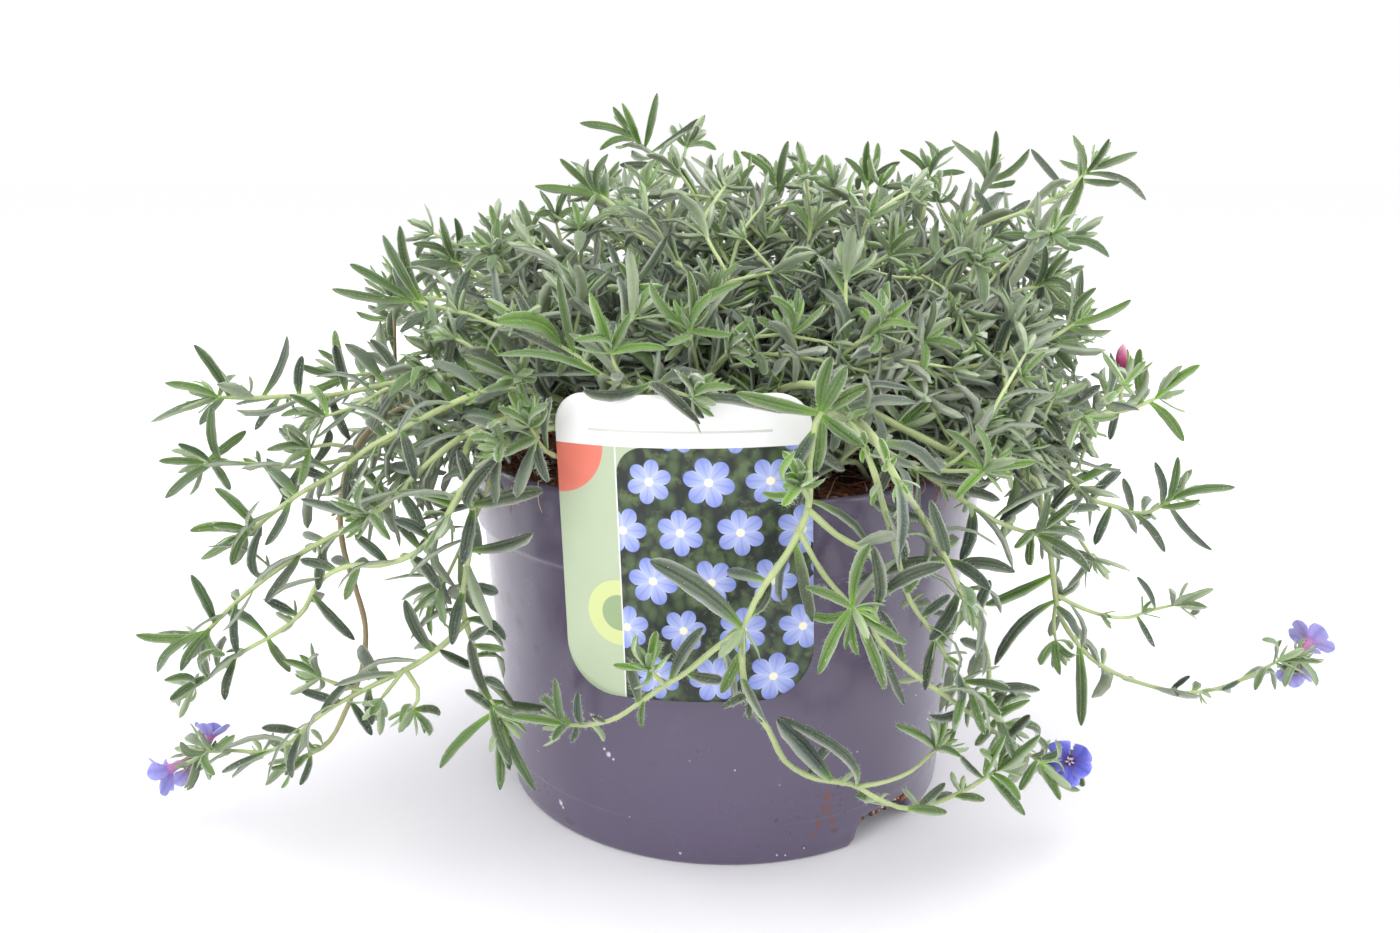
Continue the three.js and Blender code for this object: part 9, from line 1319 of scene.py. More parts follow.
10,24,0,72,28,-63,969,1067,576,1294,35,4,18,0,59,30,75,964,1140,320,1406,37,9,22,0,31,46,83,995,1118,456,1374,20,3,89,0,11,18,98,995,1104,477,1424,20,3,94,0,-43,-24,87,995,1092,508,1371,20,3,77,0,31,-8,95,200,531,119,
1312,33,4,0,0,12,86,49,312,554,393,1334,40,6,0,0,37,-58,72,424,794,279,1265,33,10,3,0,7,19,98,510,680,311,1449,34,4,0,0,86,50,-8,609,820,468,1337,34,4,4,0,26,-9,96,678,855,351,1477,31,10,2,0,-17,97,19,759,890,508,1438,
37,12,6,0,40,-48,78,846,1030,389,1322,39,5,4,0,53,18,83,920,1069,445,1484,38,7,11,0,-70,39,60]},
{"n": "shoot_back_7", "r": [80, 55], "o": 0, "k": 1, "f": 0, "p": [[597,275,1266],[657,325,1320],[695,395,1370],[710,478,1412],[709,566,1446]],
 "l": [1000,698,647,1528,25,6,54,0,23,-68,70,988,675,683,1451,27,8,51,0,13,-1,99,977,772,664,1484,30,8,35,0,-42,-9,90,965,629,616,1520,32,4,27,0,74,12,67,954,756,687,1377,35,7,25,0,-3,42,91,942,753,566,1595,37,8,15,0,
-61,79,7,995,718,593,1498,20,3,83,0,-97,-9,22,995,678,636,1454,20,3,87,0,22,-3,98,150,679,459,1310,38,4,0,0,20,-12,97,358,799,381,1389,40,8,0,0,-39,27,88,517,657,425,1496,31,12,5,0,86,49,18,686,654,584,1435,39,7,8,0,33,
-10,94,837,799,583,1527,34,9,6,0,-79,10,61]},
{"n": "shoot_back_7", "r": [80, 55], "o": 0, "k": 1, "f": 0, "p": [[731,338,1345],[808,351,1367],[886,329,1371],[953,285,1361],[1011,231,1345]],
 "l": [1000,1072,155,1367,25,8,63,0,-5,25,97,986,1112,204,1314,27,6,58,0,17,-36,92,973,1024,100,1314,30,7,55,0,41,-16,90,959,1125,195,1432,32,4,44,0,-61,-37,70,946,1067,216,1216,35,9,34,0,69,-55,47,932,977,95,1438,37,6,
11,0,73,28,63,995,1079,200,1340,20,3,90,0,-4,-23,97,995,1048,174,1310,20,3,80,0,36,-30,88,150,869,332,1466,42,4,0,0,-52,66,55,394,933,394,1456,37,5,1,0,2,-86,50,583,985,219,1282,39,8,4,0,51,-32,80,736,1044,265,1449,36,3,
9,0,-62,-58,52]},
{"n": "shoot_back_8", "r": [110, 70], "o": 0, "k": 0, "f": 0, "p": [[-420,160,1013],[-450,173,1109],[-516,199,1186],[-590,229,1254],[-673,262,1310],[-761,302,1352],[-853,344,1379],[-947,390,1390],[-1041,436,1384]],
 "l": [1000,-1129,452,1407,25,9,55,0,28,19,94,995,-1128,491,1336,27,6,52,0,-38,17,91,990,-1081,525,1410,29,4,56,0,-30,-39,87,984,-1139,397,1366,31,8,31,0,-26,35,90,979,-1063,549,1349,33,2,35,0,-48,11,87,974,-1117,427,
1504,35,9,32,0,33,91,26,969,-1104,403,1255,37,5,34,0,-83,21,52,995,-1106,470,1414,20,3,82,0,30,-19,93,995,-1103,451,1371,20,3,77,0,-15,17,97,995,-1087,483,1352,20,3,77,0,-42,16,89,200,-500,129,1320,33,5,0,0,-46,85,27,
300,-669,260,1224,33,11,0,0,6,-2,100,402,-606,297,1394,32,10,4,0,-78,-56,28,478,-787,207,1345,41,3,0,0,14,41,90,586,-762,442,1385,39,4,5,0,-36,-32,87,684,-938,276,1463,30,8,2,0,28,66,70,771,-1003,411,1287,40,10,5,0,-49,
24,84,836,-993,472,1488,34,12,10,0,-10,-75,65,924,-1135,376,1398,37,13,6,0,-3,40,91]},
{"n": "shoot_back_8", "r": [80, 55], "o": 0, "k": 1, "f": 0, "p": [[-606,235,1266],[-670,281,1322],[-706,351,1374],[-717,435,1418],[-716,526,1449]],
 "l": [1000,-730,628,1461,25,6,59,0,10,-10,99,988,-675,614,1519,27,2,57,0,-55,-35,76,977,-782,602,1516,30,5,55,0,67,-9,73,966,-672,629,1405,32,8,36,0,-4,33,94,954,-679,555,1597,35,2,23,0,-72,69,-3,942,-851,610,1412,37,4,
12,0,11,40,91,995,-726,594,1454,20,3,85,0,10,-7,99,995,-699,573,1474,20,3,84,0,-36,-32,87,150,-652,266,1420,39,6,4,0,-83,55,-7,370,-798,382,1331,35,4,0,0,0,23,97,533,-599,453,1457,41,11,7,0,-61,7,79,679,-803,463,1528,43,
6,8,0,83,27,48]},
{"n": "shoot_back_8", "r": [80, 55], "o": 0, "k": 1, "f": 0, "p": [[-743,294,1345],[-820,308,1367],[-898,286,1371],[-965,241,1361],[-1023,186,1345]],
 "l": [1000,-1058,93,1314,25,3,56,0,-35,-17,92,986,-1092,161,1289,27,6,51,0,-45,-43,78,973,-1067,75,1404,30,6,49,0,-24,51,83,960,-1065,129,1235,32,8,40,0,-56,-58,59,946,-1142,196,1370,35,10,42,0,15,-50,85,933,-953,34,
1355,37,6,21,0,-55,-15,82,995,-1059,128,1364,20,3,92,0,-5,33,94,995,-1048,140,1311,20,3,89,0,-41,-37,83,150,-833,291,1495,36,4,0,0,-69,71,-15,366,-945,224,1299,31,11,0,0,-53,-16,83,553,-1051,327,1430,36,7,10,0,10,-65,75,
731,-971,101,1417,33,5,17,0,-56,33,76]},
{"n": "shoot_back_9", "r": [110, 70], "o": 0, "k": 0, "f": 0, "p": [[-120,300,1013],[-129,327,1112],[-143,373,1206],[-159,426,1295],[-179,486,1380],[-203,553,1458],[-233,625,1529],[-269,702,1592],[-311,782,1646],[-354,
867,1691]],
 "l": [1000,-426,929,1751,25,8,58,0,57,-12,81,995,-375,978,1710,27,5,56,0,-10,-20,97,991,-372,912,1786,28,4,59,0,-44,75,-49,986,-457,940,1680,30,9,51,0,9,18,98,982,-363,959,1615,32,2,27,0,-21,51,84,977,-447,857,1792,34,
8,32,0,61,59,52,972,-355,961,1608,35,2,25,0,-21,50,84,968,-276,897,1825,37,2,32,0,-92,21,33,995,-384,912,1751,20,3,87,0,53,-51,67,995,-406,920,1708,20,3,79,0,27,-6,96,995,-348,939,1719,20,3,86,0,-31,-33,89,200,-176,288,
1325,41,11,0,0,17,85,50,288,-201,530,1275,41,10,0,0,6,-10,99,392,-80,485,1447,35,9,2,0,-78,15,61,569,-207,700,1504,42,6,1,0,-13,-26,96,635,-236,627,1655,39,10,5,0,-28,95,-17,699,-384,711,1563,34,5,8,0,18,19,97,780,-230,
846,1689,39,12,8,0,-50,-39,78,854,-389,758,1770,40,6,9,0,59,71,38,918,-364,899,1601,30,8,9,0,-22,43,88]},
{"n": "shoot_back_9", "r": [80, 55], "o": 0, "k": 1, "f": 0, "p": [[-181,491,1382],[-211,530,1447],[-260,555,1507],[-325,559,1556],[-396,548,1595],[-468,530,1628]],
 "l": [935,-472,392,1654,35,2,27,0,-38,30,88,924,-496,469,1513,37,6,31,0,-69,-38,62,995,-523,510,1634,20,3,80,0,10,8,99,995,-515,545,1660,20,3,89,0,38,-50,78,150,-282,488,1544,36,6,0,0,49,68,55,323,-340,638,1499,34,5,0,
0,1,-14,99,495,-286,571,1659,36,4,1,0,-98,-18,5,619,-468,467,1592,35,11,12,0,3,28,96,768,-487,631,1637,33,6,13,0,1,-50,87]},
{"n": "shoot_back_9", "r": [80, 55], "o": 0, "k": 1, "f": 0, "p": [[-216,582,1485],[-218,654,1553],[-174,722,1606],[-104,779,1642],[-22,827,1667]],
 "l": [1000,40,902,1705,25,9,63,0,-3,-43,90,989,100,852,1669,27,4,42,0,-6,16,99,978,32,858,1751,28,7,45,0,-66,-40,63,966,38,922,1646,30,4,41,0,26,-1,97,955,91,780,1712,32,6,31,0,-17,52,84,944,-47,955,1703,34,8,25,0,50,
-23,84,933,69,850,1573,35,3,32,0,53,27,80,921,24,767,1813,37,9,11,0,13,97,22,995,10,837,1709,20,3,97,0,-79,22,57,995,30,890,1678,20,3,80,0,7,-23,97,995,53,837,1667,20,3,90,0,-4,20,98,150,-172,755,1536,40,8,0,0,-15,-1,99,
372,-165,684,1699,41,11,0,0,-19,98,9,539,-151,848,1640,38,9,3,0,29,-25,92,706,15,753,1659,34,7,10,0,-11,37,92,826,-58,881,1760,32,5,10,0,62,-68,40]},
{"n": "shoot_back_10", "r": [110, 70], "o": 0, "k": 0, "f": 0, "p": [[180,300,1013],[190,326,1112],[208,367,1208],[230,414,1299],[254,469,1386],[279,531,1467],[306,601,1542],[330,679,1609],[353,764,1668],[378,853,1718]],
 "l": [1000,399,912,1797,25,4,48,0,-39,-69,61,995,368,956,1747,27,3,54,0,21,-26,94,991,461,916,1770,28,5,41,0,-55,-2,84,986,294,901,1759,30,10,33,0,57,14,81,982,410,963,1686,32,2,36,0,4,17,98,977,446,853,1826,34,6,29,0,
-73,59,35,972,307,959,1685,35,10,15,0,19,24,95,968,519,901,1680,37,6,20,0,-2,34,94,995,390,888,1753,20,3,92,0,-26,-62,74,200,147,505,1241,31,11,0,0,25,-24,94,299,364,408,1388,30,9,0,0,-63,21,75,386,135,457,1443,38,12,0,
0,70,18,69,487,309,613,1428,31,4,3,0,-2,-8,100,578,396,598,1500,43,10,3,0,-22,14,97,652,227,691,1585,37,5,4,0,47,-10,88,713,437,725,1598,34,12,6,0,-27,7,96,782,333,702,1770,32,4,11,0,36,93,-12,854,298,901,1651,39,9,8,0,
20,5,98,913,470,821,1749,36,12,2,0,-58,27,77]},
{"n": "shoot_back_10", "r": [80, 55], "o": 0, "k": 1, "f": 0, "p": [[256,474,1389],[259,521,1456],[238,571,1516],[193,617,1565],[134,658,1603],[68,695,1635]],
 "l": [1000,-37,735,1656,25,6,68,0,20,1,98,989,21,781,1707,27,4,47,0,-9,-67,74,978,-27,669,1705,30,10,38,0,40,56,72,968,-19,804,1597,32,8,46,0,-25,5,97,957,67,728,1778,35,2,34,0,-99,-13,-6,946,-55,627,1602,37,7,12,0,-27,
26,93,995,17,731,1643,20,3,87,0,8,-12,99,995,36,728,1686,20,3,84,0,22,-75,63,995,20,686,1677,20,3,83,0,47,58,66,150,269,668,1485,32,10,0,0,-4,-27,96,312,319,572,1593,39,6,0,0,-84,19,52,494,109,575,1621,36,10,5,0,46,49,
74,629,116,773,1556,38,4,5,0,-21,0,98,746,117,665,1758,39,6,10,0,-77,60,-22]},
{"n": "shoot_back_10", "r": [80, 55], "o": 0, "k": 1, "f": 0, "p": [[290,560,1496],[335,611,1566],[413,633,1619],[504,630,1655],[597,613,1678]],
 "l": [1000,685,627,1713,25,3,54,0,-30,-31,90,989,705,552,1675,27,3,55,0,9,14,99,978,668,595,1779,29,3,46,0,-74,28,62,966,700,652,1653,31,3,29,0,24,-19,95,955,651,486,1719,33,9,37,0,27,45,85,944,655,695,1783,35,2,25,0,
12,-85,51,932,673,576,1564,37,2,14,0,68,-18,71,995,657,582,1718,20,3,81,0,-32,44,84,995,655,625,1714,20,3,79,0,-40,-44,80,995,672,591,1664,20,3,85,0,17,0,99,150,436,655,1583,42,4,0,0,-33,-1,94,336,404,583,1703,31,6,0,0,
8,95,29,482,467,749,1641,33,3,5,0,25,-32,91,676,586,553,1644,32,4,11,0,16,20,97,833,594,630,1793,39,12,16,0,48,-86,-19]},
{"n": "shoot_back_11", "r": [110, 70], "o": 0, "k": 0, "f": 0, "p": [[-300,-20,1013],[-330,-21,1112],[-380,-24,1206],[-438,-28,1294],[-506,-32,1376],[-581,-28,1451],[-664,-19,1517],[-753,-6,1573],[-848,7,1619]],
 "l": [964,-917,98,1540,37,8,14,0,-48,12,87,200,-360,-150,1302,30,6,0,0,-28,69,66,298,-570,44,1278,39,7,0,0,14,-18,97,413,-445,-32,1485,34,3,0,0,-100,0,8,514,-669,-101,1428,40,3,2,0,16,23,96,589,-568,74,1503,39,9,2,0,
-34,-56,76,670,-640,-100,1579,34,5,1,0,-26,82,51,748,-809,16,1514,34,7,6,0,-2,-4,100,836,-788,74,1597,36,3,2,0,-8,-47,88,897,-881,-34,1562,42,4,8,0,-20,12,97]},
{"n": "shoot_back_11", "r": [80, 55], "o": 0, "k": 1, "f": 0, "p": [[-480,-29,1342],[-536,-47,1417],[-580,-100,1482],[-605,-190,1536],[-623,-271,1576]],
 "l": [1000,-600,-348,1618,25,9,47,0,-42,34,84,989,-707,-324,1603,27,10,58,0,41,-16,90,978,-609,-255,1667,30,5,43,0,-35,-93,13,966,-612,-398,1543,32,10,39,0,-10,-20,97,955,-684,-367,1532,35,5,28,0,-2,-31,95,944,-486,
-334,1656,37,5,27,0,-62,-19,76,995,-647,-340,1596,20,3,99,0,16,23,96,995,-600,-326,1610,20,3,76,0,-50,30,81,150,-628,-8,1368,34,8,0,0,-20,-9,98,307,-649,-78,1490,40,10,0,0,50,-9,86,505,-524,-162,1573,42,9,0,0,-81,9,57,
668,-688,-285,1488,38,8,12,0,1,-25,97,835,-617,-220,1666,36,12,22,0,-11,-99,-2]},
{"n": "shoot_back_11", "r": [80, 55], "o": 0, "k": 1, "f": 0, "p": [[-565,-29,1437],[-632,-1,1502],[-677,66,1555],[-701,153,1591],[-712,246,1617]],
 "l": [1000,-768,339,1631,25,7,68,0,28,2,96,989,-674,338,1662,27,4,52,0,-45,-24,86,966,-701,345,1581,30,3,44,0,-7,28,96,932,-595,328,1603,35,3,33,0,-24,32,92,995,-738,312,1620,20,3,93,0,16,1,99,995,-681,313,1635,20,3,77,
0,-37,-9,92,150,-624,-49,1611,32,10,8,0,-46,87,16,319,-763,76,1502,41,5,0,0,-4,18,98,497,-634,162,1635,33,10,5,0,-65,-30,70,668,-810,161,1521,39,4,11,0,-26,50,82,800,-683,321,1520,34,10,18,0,-6,47,88]},
{"n": "shoot_back_12", "r": [110, 70], "o": 0, "k": 0, "f": 0, "p": [[380,-40,1013],[413,-39,1117],[470,-38,1214],[537,-38,1305],[613,-36,1387],[698,-34,1461],[791,-30,1524],[891,-25,1576],[996,-18,1616]],
 "l": [200,438,-166,1310,33,6,0,0,35,67,66,295,515,77,1361,36,9,0,0,21,-71,68,390,665,-55,1350,35,3,0,0,-27,9,96,473,603,-41,1502,37,10,0,0,99,14,-5,571,799,75,1459,36,6,5,0,1,-27,96,646,712,-34,1612,43,10,5,0,100,5,1,
712,824,67,1514,34,11,3,0,24,-22,94,778,949,-95,1534,36,5,4,0,11,18,98,851,944,-45,1717,38,4,5,0,-4,99,15,920,968,55,1655,35,7,17,0,27,-69,67]},
{"n": "shoot_back_12", "r": [80, 55], "o": 0, "k": 1, "f": 0, "p": [[584,-37,1353],[642,-16,1427],[683,41,1493],[703,120,1545],[711,206,1587]],
 "l": [1000,687,292,1626,25,6,57,0,31,-32,90,989,730,238,1659,27,4,43,0,-97,7,22,977,653,266,1609,28,8,39,0,44,4,90,966,690,333,1569,30,9,53,0,8,10,99,954,786,245,1664,32,5,33,0,-78,13,61,943,666,246,1687,34,3,31,0,93,2,
35,932,796,296,1515,35,5,21,0,4,44,89,920,731,184,1742,37,3,11,0,-22,98,0,995,687,262,1634,20,3,87,0,55,-39,74,995,721,285,1589,20,3,97,0,-3,-3,100,150,662,114,1459,36,3,3,0,15,-43,89,320,687,102,1404,33,11,11,0,23,31,
92,509,647,48,1640,39,7,6,0,76,63,17,650,702,177,1474,39,10,11,0,9,49,87,804,822,197,1654,34,10,8,0,-70,22,68]},
{"n": "shoot_back_12", "r": [80, 55], "o": 0, "k": 1, "f": 0, "p": [[680,-34,1447],[749,-53,1507],[799,-116,1559],[828,-203,1598],[845,-298,1626]],
 "l": [1000,882,-372,1681,25,5,62,0,-50,34,80,989,853,-412,1604,27,4,45,0,5,-18,98,978,762,-359,1673,30,6,53,0,60,-15,79,955,749,-385,1625,35,8,39,0,30,-25,92,944,911,-303,1773,37,3,33,0,-64,-75,17,995,820,-373,1638,20,
3,94,0,28,5,96,150,768,56,1598,41,3,0,0,19,-77,61,311,869,-160,1489,42,13,0,0,16,-17,97,679,904,-249,1619,42,6,12,0,-40,-7,91,844,777,-392,1587,32,6,11,0,18,-22,96]},
{"n": "shoot_back_2", "r": [80, 55], "o": 0, "k": 1, "f": 0, "p": [[-326,627,1240],[-422,729,1235],[-594,726,1141],[-739,746,1030]],
 "l": [1000,-822,723,985,25,9,63,0,-51,15,85,992,-799,801,935,27,10,58,0,-77,19,61,983,-856,763,1043,29,8,43,0,6,0,100,975,-783,684,924,31,3,50,0,-88,-7,46,966,-786,857,1011,33,7,33,0,-57,-9,82,958,-857,655,1070,35,8,23,
0,-19,54,82,950,-681,768,894,37,9,22,0,-88,46,-13,995,-780,758,977,20,3,88,0,-77,13,62,995,-810,783,1013,20,3,78,0,-30,-11,95,995,-795,721,998,20,3,91,0,-55,15,82,150,-382,763,1138,37,4,0,0,-40,69,61,301,-516,719,1300,
40,10,0,0,38,60,70,416,-543,656,1102,38,5,0,0,-78,-8,61,544,-601,837,1102,36,7,8,0,-72,3,70,685,-625,689,1021,36,11,13,0,-95,-18,25,781,-692,769,961,30,12,5,0,-91,23,35,899,-804,804,1091,31,7,10,0,-3,-43,90]},
{"n": "shoot_back_6", "r": [80, 55], "o": 0, "k": 1, "f": 0, "p": [[512,505,1235],[579,596,1227],[584,697,1111],[603,790,991]],
 "l": [1000,631,827,893,25,3,69,0,28,87,41,990,636,887,957,27,3,47,0,3,34,94,979,556,829,911,28,7,52,0,-3,88,47,969,696,819,926,30,6,53,0,26,70,67,958,563,919,991,32,8,33,0,31,18,93,948,583,740,860,34,7,23,0,10,97,-24,
938,724,880,1022,35,7,31,0,-34,33,88,927,453,849,973,37,3,11,0,12,65,75,995,592,848,950,20,3,99,0,14,60,79,995,608,806,928,20,3,76,0,22,94,27,995,640,832,967,20,3,83,0,2,51,86,150,688,546,1176,33,8,0,0,36,43,83,336,594,
740,1286,37,4,0,0,28,-39,88,510,533,608,1049,38,8,1,0,-64,77,0,680,705,795,1072,42,6,6,0,-15,50,85,832,523,854,1010,37,3,12,0,25,48,84]},
{"n": "shoot_left_woody", "r": [80, 55], "o": 0, "k": 1, "f": 0, "p": [[-877,-221,1163],[-931,-216,1135],[-967,-159,1102],[-1005,-117,1054]],
 "l": [1000,-1050,-86,973,25,8,67,0,-59,59,56,979,-1035,-21,1021,27,6,61,0,-38,20,90,958,-1122,-100,1012,28,8,44,0,-25,46,85,938,-986,-68,957,30,6,32,0,-47,80,38,917,-1085,-11,1091,32,7,44,0,2,-20,98,896,-1079,-180,962,
34,6,20,0,-80,37,47,875,-929,19,1023,35,5,26,0,-48,44,76,854,-1145,-115,1123,37,9,29,0,31,56,77,995,-1068,-86,1020,20,3,89,0,-28,41,87,995,-1025,-88,989,20,3,99,0,-58,66,48,995,-1027,-54,1047,20,3,78,0,-33,0,94,150,
-1003,-214,1218,41,9,0,0,53,-25,81,500,-994,-88,1202,34,12,0,0,1,-63,78,742,-1020,-185,945,33,4,12,0,-86,48,14]},
{"n": "shoot_right_drop", "r": [80, 55], "o": 0, "k": 1, "f": 0, "p": [[601,-424,1175],[670,-443,1166],[723,-437,1085],[776,-437,1003]],
 "l": [1000,825,-389,923,25,8,49,0,81,13,58,967,883,-407,968,28,3,49,0,37,-8,92,951,758,-412,895,30,3,42,0,96,27,-3,918,833,-327,975,34,7,38,0,61,-5,79,902,708,-528,895,35,10,35,0,65,-72,25,885,921,-456,1067,37,3,14,0,
-20,13,97,995,806,-413,947,20,3,86,0,85,13,51,995,851,-444,975,20,3,90,0,36,3,93,150,747,-335,1173,33,9,0,0,33,-36,87,448,629,-490,981,40,11,0,0,87,-47,-19,660,881,-456,1053,43,8,8,0,22,12,97]},
{"n": "shoot_back_3", "r": [80, 55], "o": 0, "k": 1, "f": 0, "p": [[-116,587,1224],[-140,663,1238],[-172,736,1131],[-201,806,1030]],
 "l": [1000,-212,839,929,25,9,57,0,-35,88,32,987,-205,901,990,27,5,47,0,-24,38,89,975,-244,804,946,29,6,39,0,-59,74,32,962,-135,846,944,31,7,47,0,-1,90,44,949,-269,908,1049,33,3,27,0,15,6,99,936,-233,730,914,35,7,26,0,
-87,49,2,924,-103,912,1042,37,3,22,0,-43,40,81,995,-221,836,980,20,3,88,0,-33,74,59,995,-185,862,976,20,3,87,0,-22,71,67,995,-242,859,1008,20,3,75,0,-5,37,93,150,-51,771,1239,30,9,0,0,-31,15,94,371,-215,773,1273,35,3,0,
0,41,-8,91,550,-219,631,1049,40,12,7,0,-92,29,25,721,-147,898,1063,39,11,9,0,-32,36,88,872,-260,896,1043,40,12,18,0,0,21,98]},
{"n": "shoot_back_7", "r": [70, 55], "o": 0, "k": 1, "f": 0, "p": [[795,351,1364],[928,368,1341],[1015,411,1197],[1107,445,1049]],
 "l": [1000,1136,491,963,25,5,49,0,77,43,48,991,1174,411,966,27,9,42,0,80,14,58,982,1198,525,1008,28,7,40,0,42,5,91,973,1084,449,931,30,3,33,0,89,46,-8,964,1220,409,1035,32,7,33,0,30,32,90,955,1109,584,1003,34,6,24,0,61,
28,74,946,1097,340,968,35,9,21,0,86,-35,37,937,1237,500,1114,37,10,15,0,-19,-13,97,995,1157,443,993,20,3,100,0,74,22,64,995,1153,480,1018,20,3,83,0,50,14,86,995,1108,464,977,20,3,95,0,83,53,16,150,950,387,1423,43,4,0,0,
-41,-44,80,311,970,495,1304,37,3,5,0,60,3,80,457,1020,273,1188,31,4,2,0,86,-5,50,579,1078,499,1227,35,3,7,0,25,-10,96,687,967,413,1035,37,7,4,0,72,64,-25,788,1201,379,1114,34,9,5,0,28,35,90,879,1074,536,1043,39,10,14,0,
61,40,68]},
{"n": "shoot_back_8", "r": [70, 55], "o": 0, "k": 1, "f": 0, "p": [[-689,315,1348],[-758,402,1359],[-858,451,1220],[-945,506,1085]],
 "l": [1000,-998,507,992,25,2,50,0,-80,39,45,990,-970,580,1025,27,4,58,0,-57,41,72,981,-1059,512,1045,28,6,48,0,-32,35,88,972,-929,513,970,30,6,36,0,-76,65,0,962,-1015,619,1087,32,3,32,0,-30,-10,95,953,-1031,417,1023,34,
5,31,0,-73,23,65,943,-861,610,1008,35,6,15,0,-40,73,55,934,-1088,540,1157,37,6,15,0,33,24,91,995,-991,553,1047,20,3,83,0,-46,26,85,995,-1000,503,1040,20,3,99,0,-61,35,71,995,-946,530,1015,20,3,80,0,-70,67,25,150,-666,
515,1388,38,12,0,0,-45,0,89,283,-872,397,1361,37,7,0,0,-1,46,89,452,-720,451,1181,41,12,2,0,-41,91,-3,610,-968,570,1232,42,9,10,0,-24,-15,96,719,-969,380,1110,33,7,5,0,-75,21,63,851,-891,577,1036,40,10,14,0,-55,67,50]},
{"n": "shoot_back_4", "r": [80, 55], "o": 0, "k": 1, "f": 0, "p": [[106,707,1250],[148,816,1243],[230,890,1152],[298,968,1051]],
 "l": [1000,335,1000,964,25,8,54,0,59,65,49,989,379,1021,1030,27,8,45,0,8,29,95,978,280,1063,980,29,9,51,0,43,59,69,968,392,938,965,31,9,42,0,66,48,58,957,352,1088,1087,33,10,29,0,17,-25,95,946,231,972,930,35,8,32,0,23,
97,3,935,453,939,1083,37,5,27,0,-1,60,80,995,310,1012,1016,20,3,81,0,43,50,75,995,341,974,992,20,3,98,0,64,56,53,995,343,998,1037,20,3,95,0,12,31,94,150,41,846,1213,35,4,0,0,17,52,84,313,311,838,1272,33,7,0,0,-22,53,82,
463,168,1008,1185,37,12,0,0,54,18,82,627,301,847,1029,37,12,10,0,83,39,40,783,372,1007,1148,40,6,15,0,-29,4,96]},
{"n": "shoot_left_mid", "r": [80, 55], "o": 0, "k": 1, "f": 0, "p": [[-669,-496,1216],[-738,-515,1188],[-790,-505,1126],[-842,-501,1053]],
 "l": [1000,-921,-525,997,25,6,56,0,-59,6,81,982,-862,-481,947,27,4,57,0,-95,18,23,965,-954,-452,1016,28,9,60,0,-38,-9,92,947,-894,-592,994,30,8,45,0,-72,-6,69,929,-846,-404,964,32,7,27,0,-78,39,48,912,-959,-527,1076,34,
6,33,0,-1,21,98,894,-778,-562,951,35,6,36,0,-75,-66,3,876,-907,-360,1072,37,8,18,0,-51,-25,82,995,-878,-521,1008,20,3,84,0,-77,-2,63,995,-864,-477,978,20,3,85,0,-91,22,35,995,-904,-483,1031,20,3,91,0,-36,-5,93,150,-785,
-422,1128,35,11,0,0,-72,-6,69,403,-870,-432,1147,35,6,1,0,-35,-17,92,720,-788,-589,1002,32,9,9,0,-83,-48,29]},
{"n": "shoot_back_3", "r": [70, 55], "o": 0, "k": 1, "f": 0, "p": [[-191,783,1064],[-242,817,1016],[-366,805,1055],[-466,803,1049]],
 "l": [1000,-560,771,1037,25,3,47,0,-18,16,97,986,-544,853,1060,27,6,65,0,-11,-37,92,972,-567,770,1110,28,5,47,0,32,46,83,958,-545,786,977,30,7,54,0,-63,-1,78,944,-549,879,1109,32,8,39,0,-5,-65,76,930,-534,698,1071,34,7,
38,0,-32,42,85,915,-517,892,956,35,5,23,0,-71,13,69,901,-524,799,1192,37,10,26,0,-85,1,-53,995,-539,821,1033,20,3,81,0,-23,-10,97,995,-533,811,1079,20,3,93,0,38,-17,91,995,-522,769,1032,20,3,94,0,-36,14,92,150,-345,893,
1078,32,12,0,0,30,1,96,388,-386,741,973,42,12,0,0,-37,7,93,598,-449,888,1147,37,8,1,0,9,-72,69,780,-494,711,1090,34,10,12,0,-19,50,84]},
{"n": "shoot_back_6", "r": [70, 55], "o": 0, "k": 1, "f": 0, "p": [[584,664,1154],[606,685,1110],[680,658,1089],[739,643,1048]],
 "l": [1000,807,600,966,25,3,62,0,71,-19,68,979,859,609,1044,27,10,40,0,6,2,100,958,805,681,965,28,7,38,0,79,-9,61,938,787,552,1013,30,8,55,0,57,-2,82,917,845,685,1069,32,6,26,0,6,-44,90,896,726,636,916,34,9,30,0,95,-30,
5,875,818,548,1111,35,8,16,0,20,57,79,854,795,785,1021,37,7,25,0,66,-14,74,995,796,622,1036,20,3,94,0,22,2,97,995,798,661,1013,20,3,91,0,54,-19,82,995,771,609,991,20,3,79,0,76,-27,59,150,730,676,1091,33,11,0,0,24,55,80,
468,706,758,1064,39,11,0,0,59,-18,78,737,725,650,949,41,6,8,0,94,-24,23]},
{"n": "shoot_left_woody", "r": [80, 55], "o": 0, "k": 1, "f": 0, "p": [[-786,-200,1173],[-912,-177,1163],[-992,-14,1150],[-1077,109,1099]],
 "l": [1000,-1113,190,1045,25,4,63,0,-33,42,85,991,-1123,192,1123,27,2,48,0,1,-25,97,981,-1187,150,1058,29,7,52,0,-16,44,89,972,-1052,214,1074,31,6,37,0,-42,29,86,963,-1177,146,1160,33,2,45,0,55,36,76,954,-1096,119,963,
35,7,16,0,-60,75,27,944,-1042,218,1185,37,7,18,0,-76,-24,60,995,-1118,149,1051,20,3,83,0,-38,52,76,995,-1099,175,1105,20,3,78,0,-21,-14,97,995,-1128,136,1101,20,3,76,0,18,29,94,150,-914,-53,1121,31,5,0,0,-58,2,81,304,
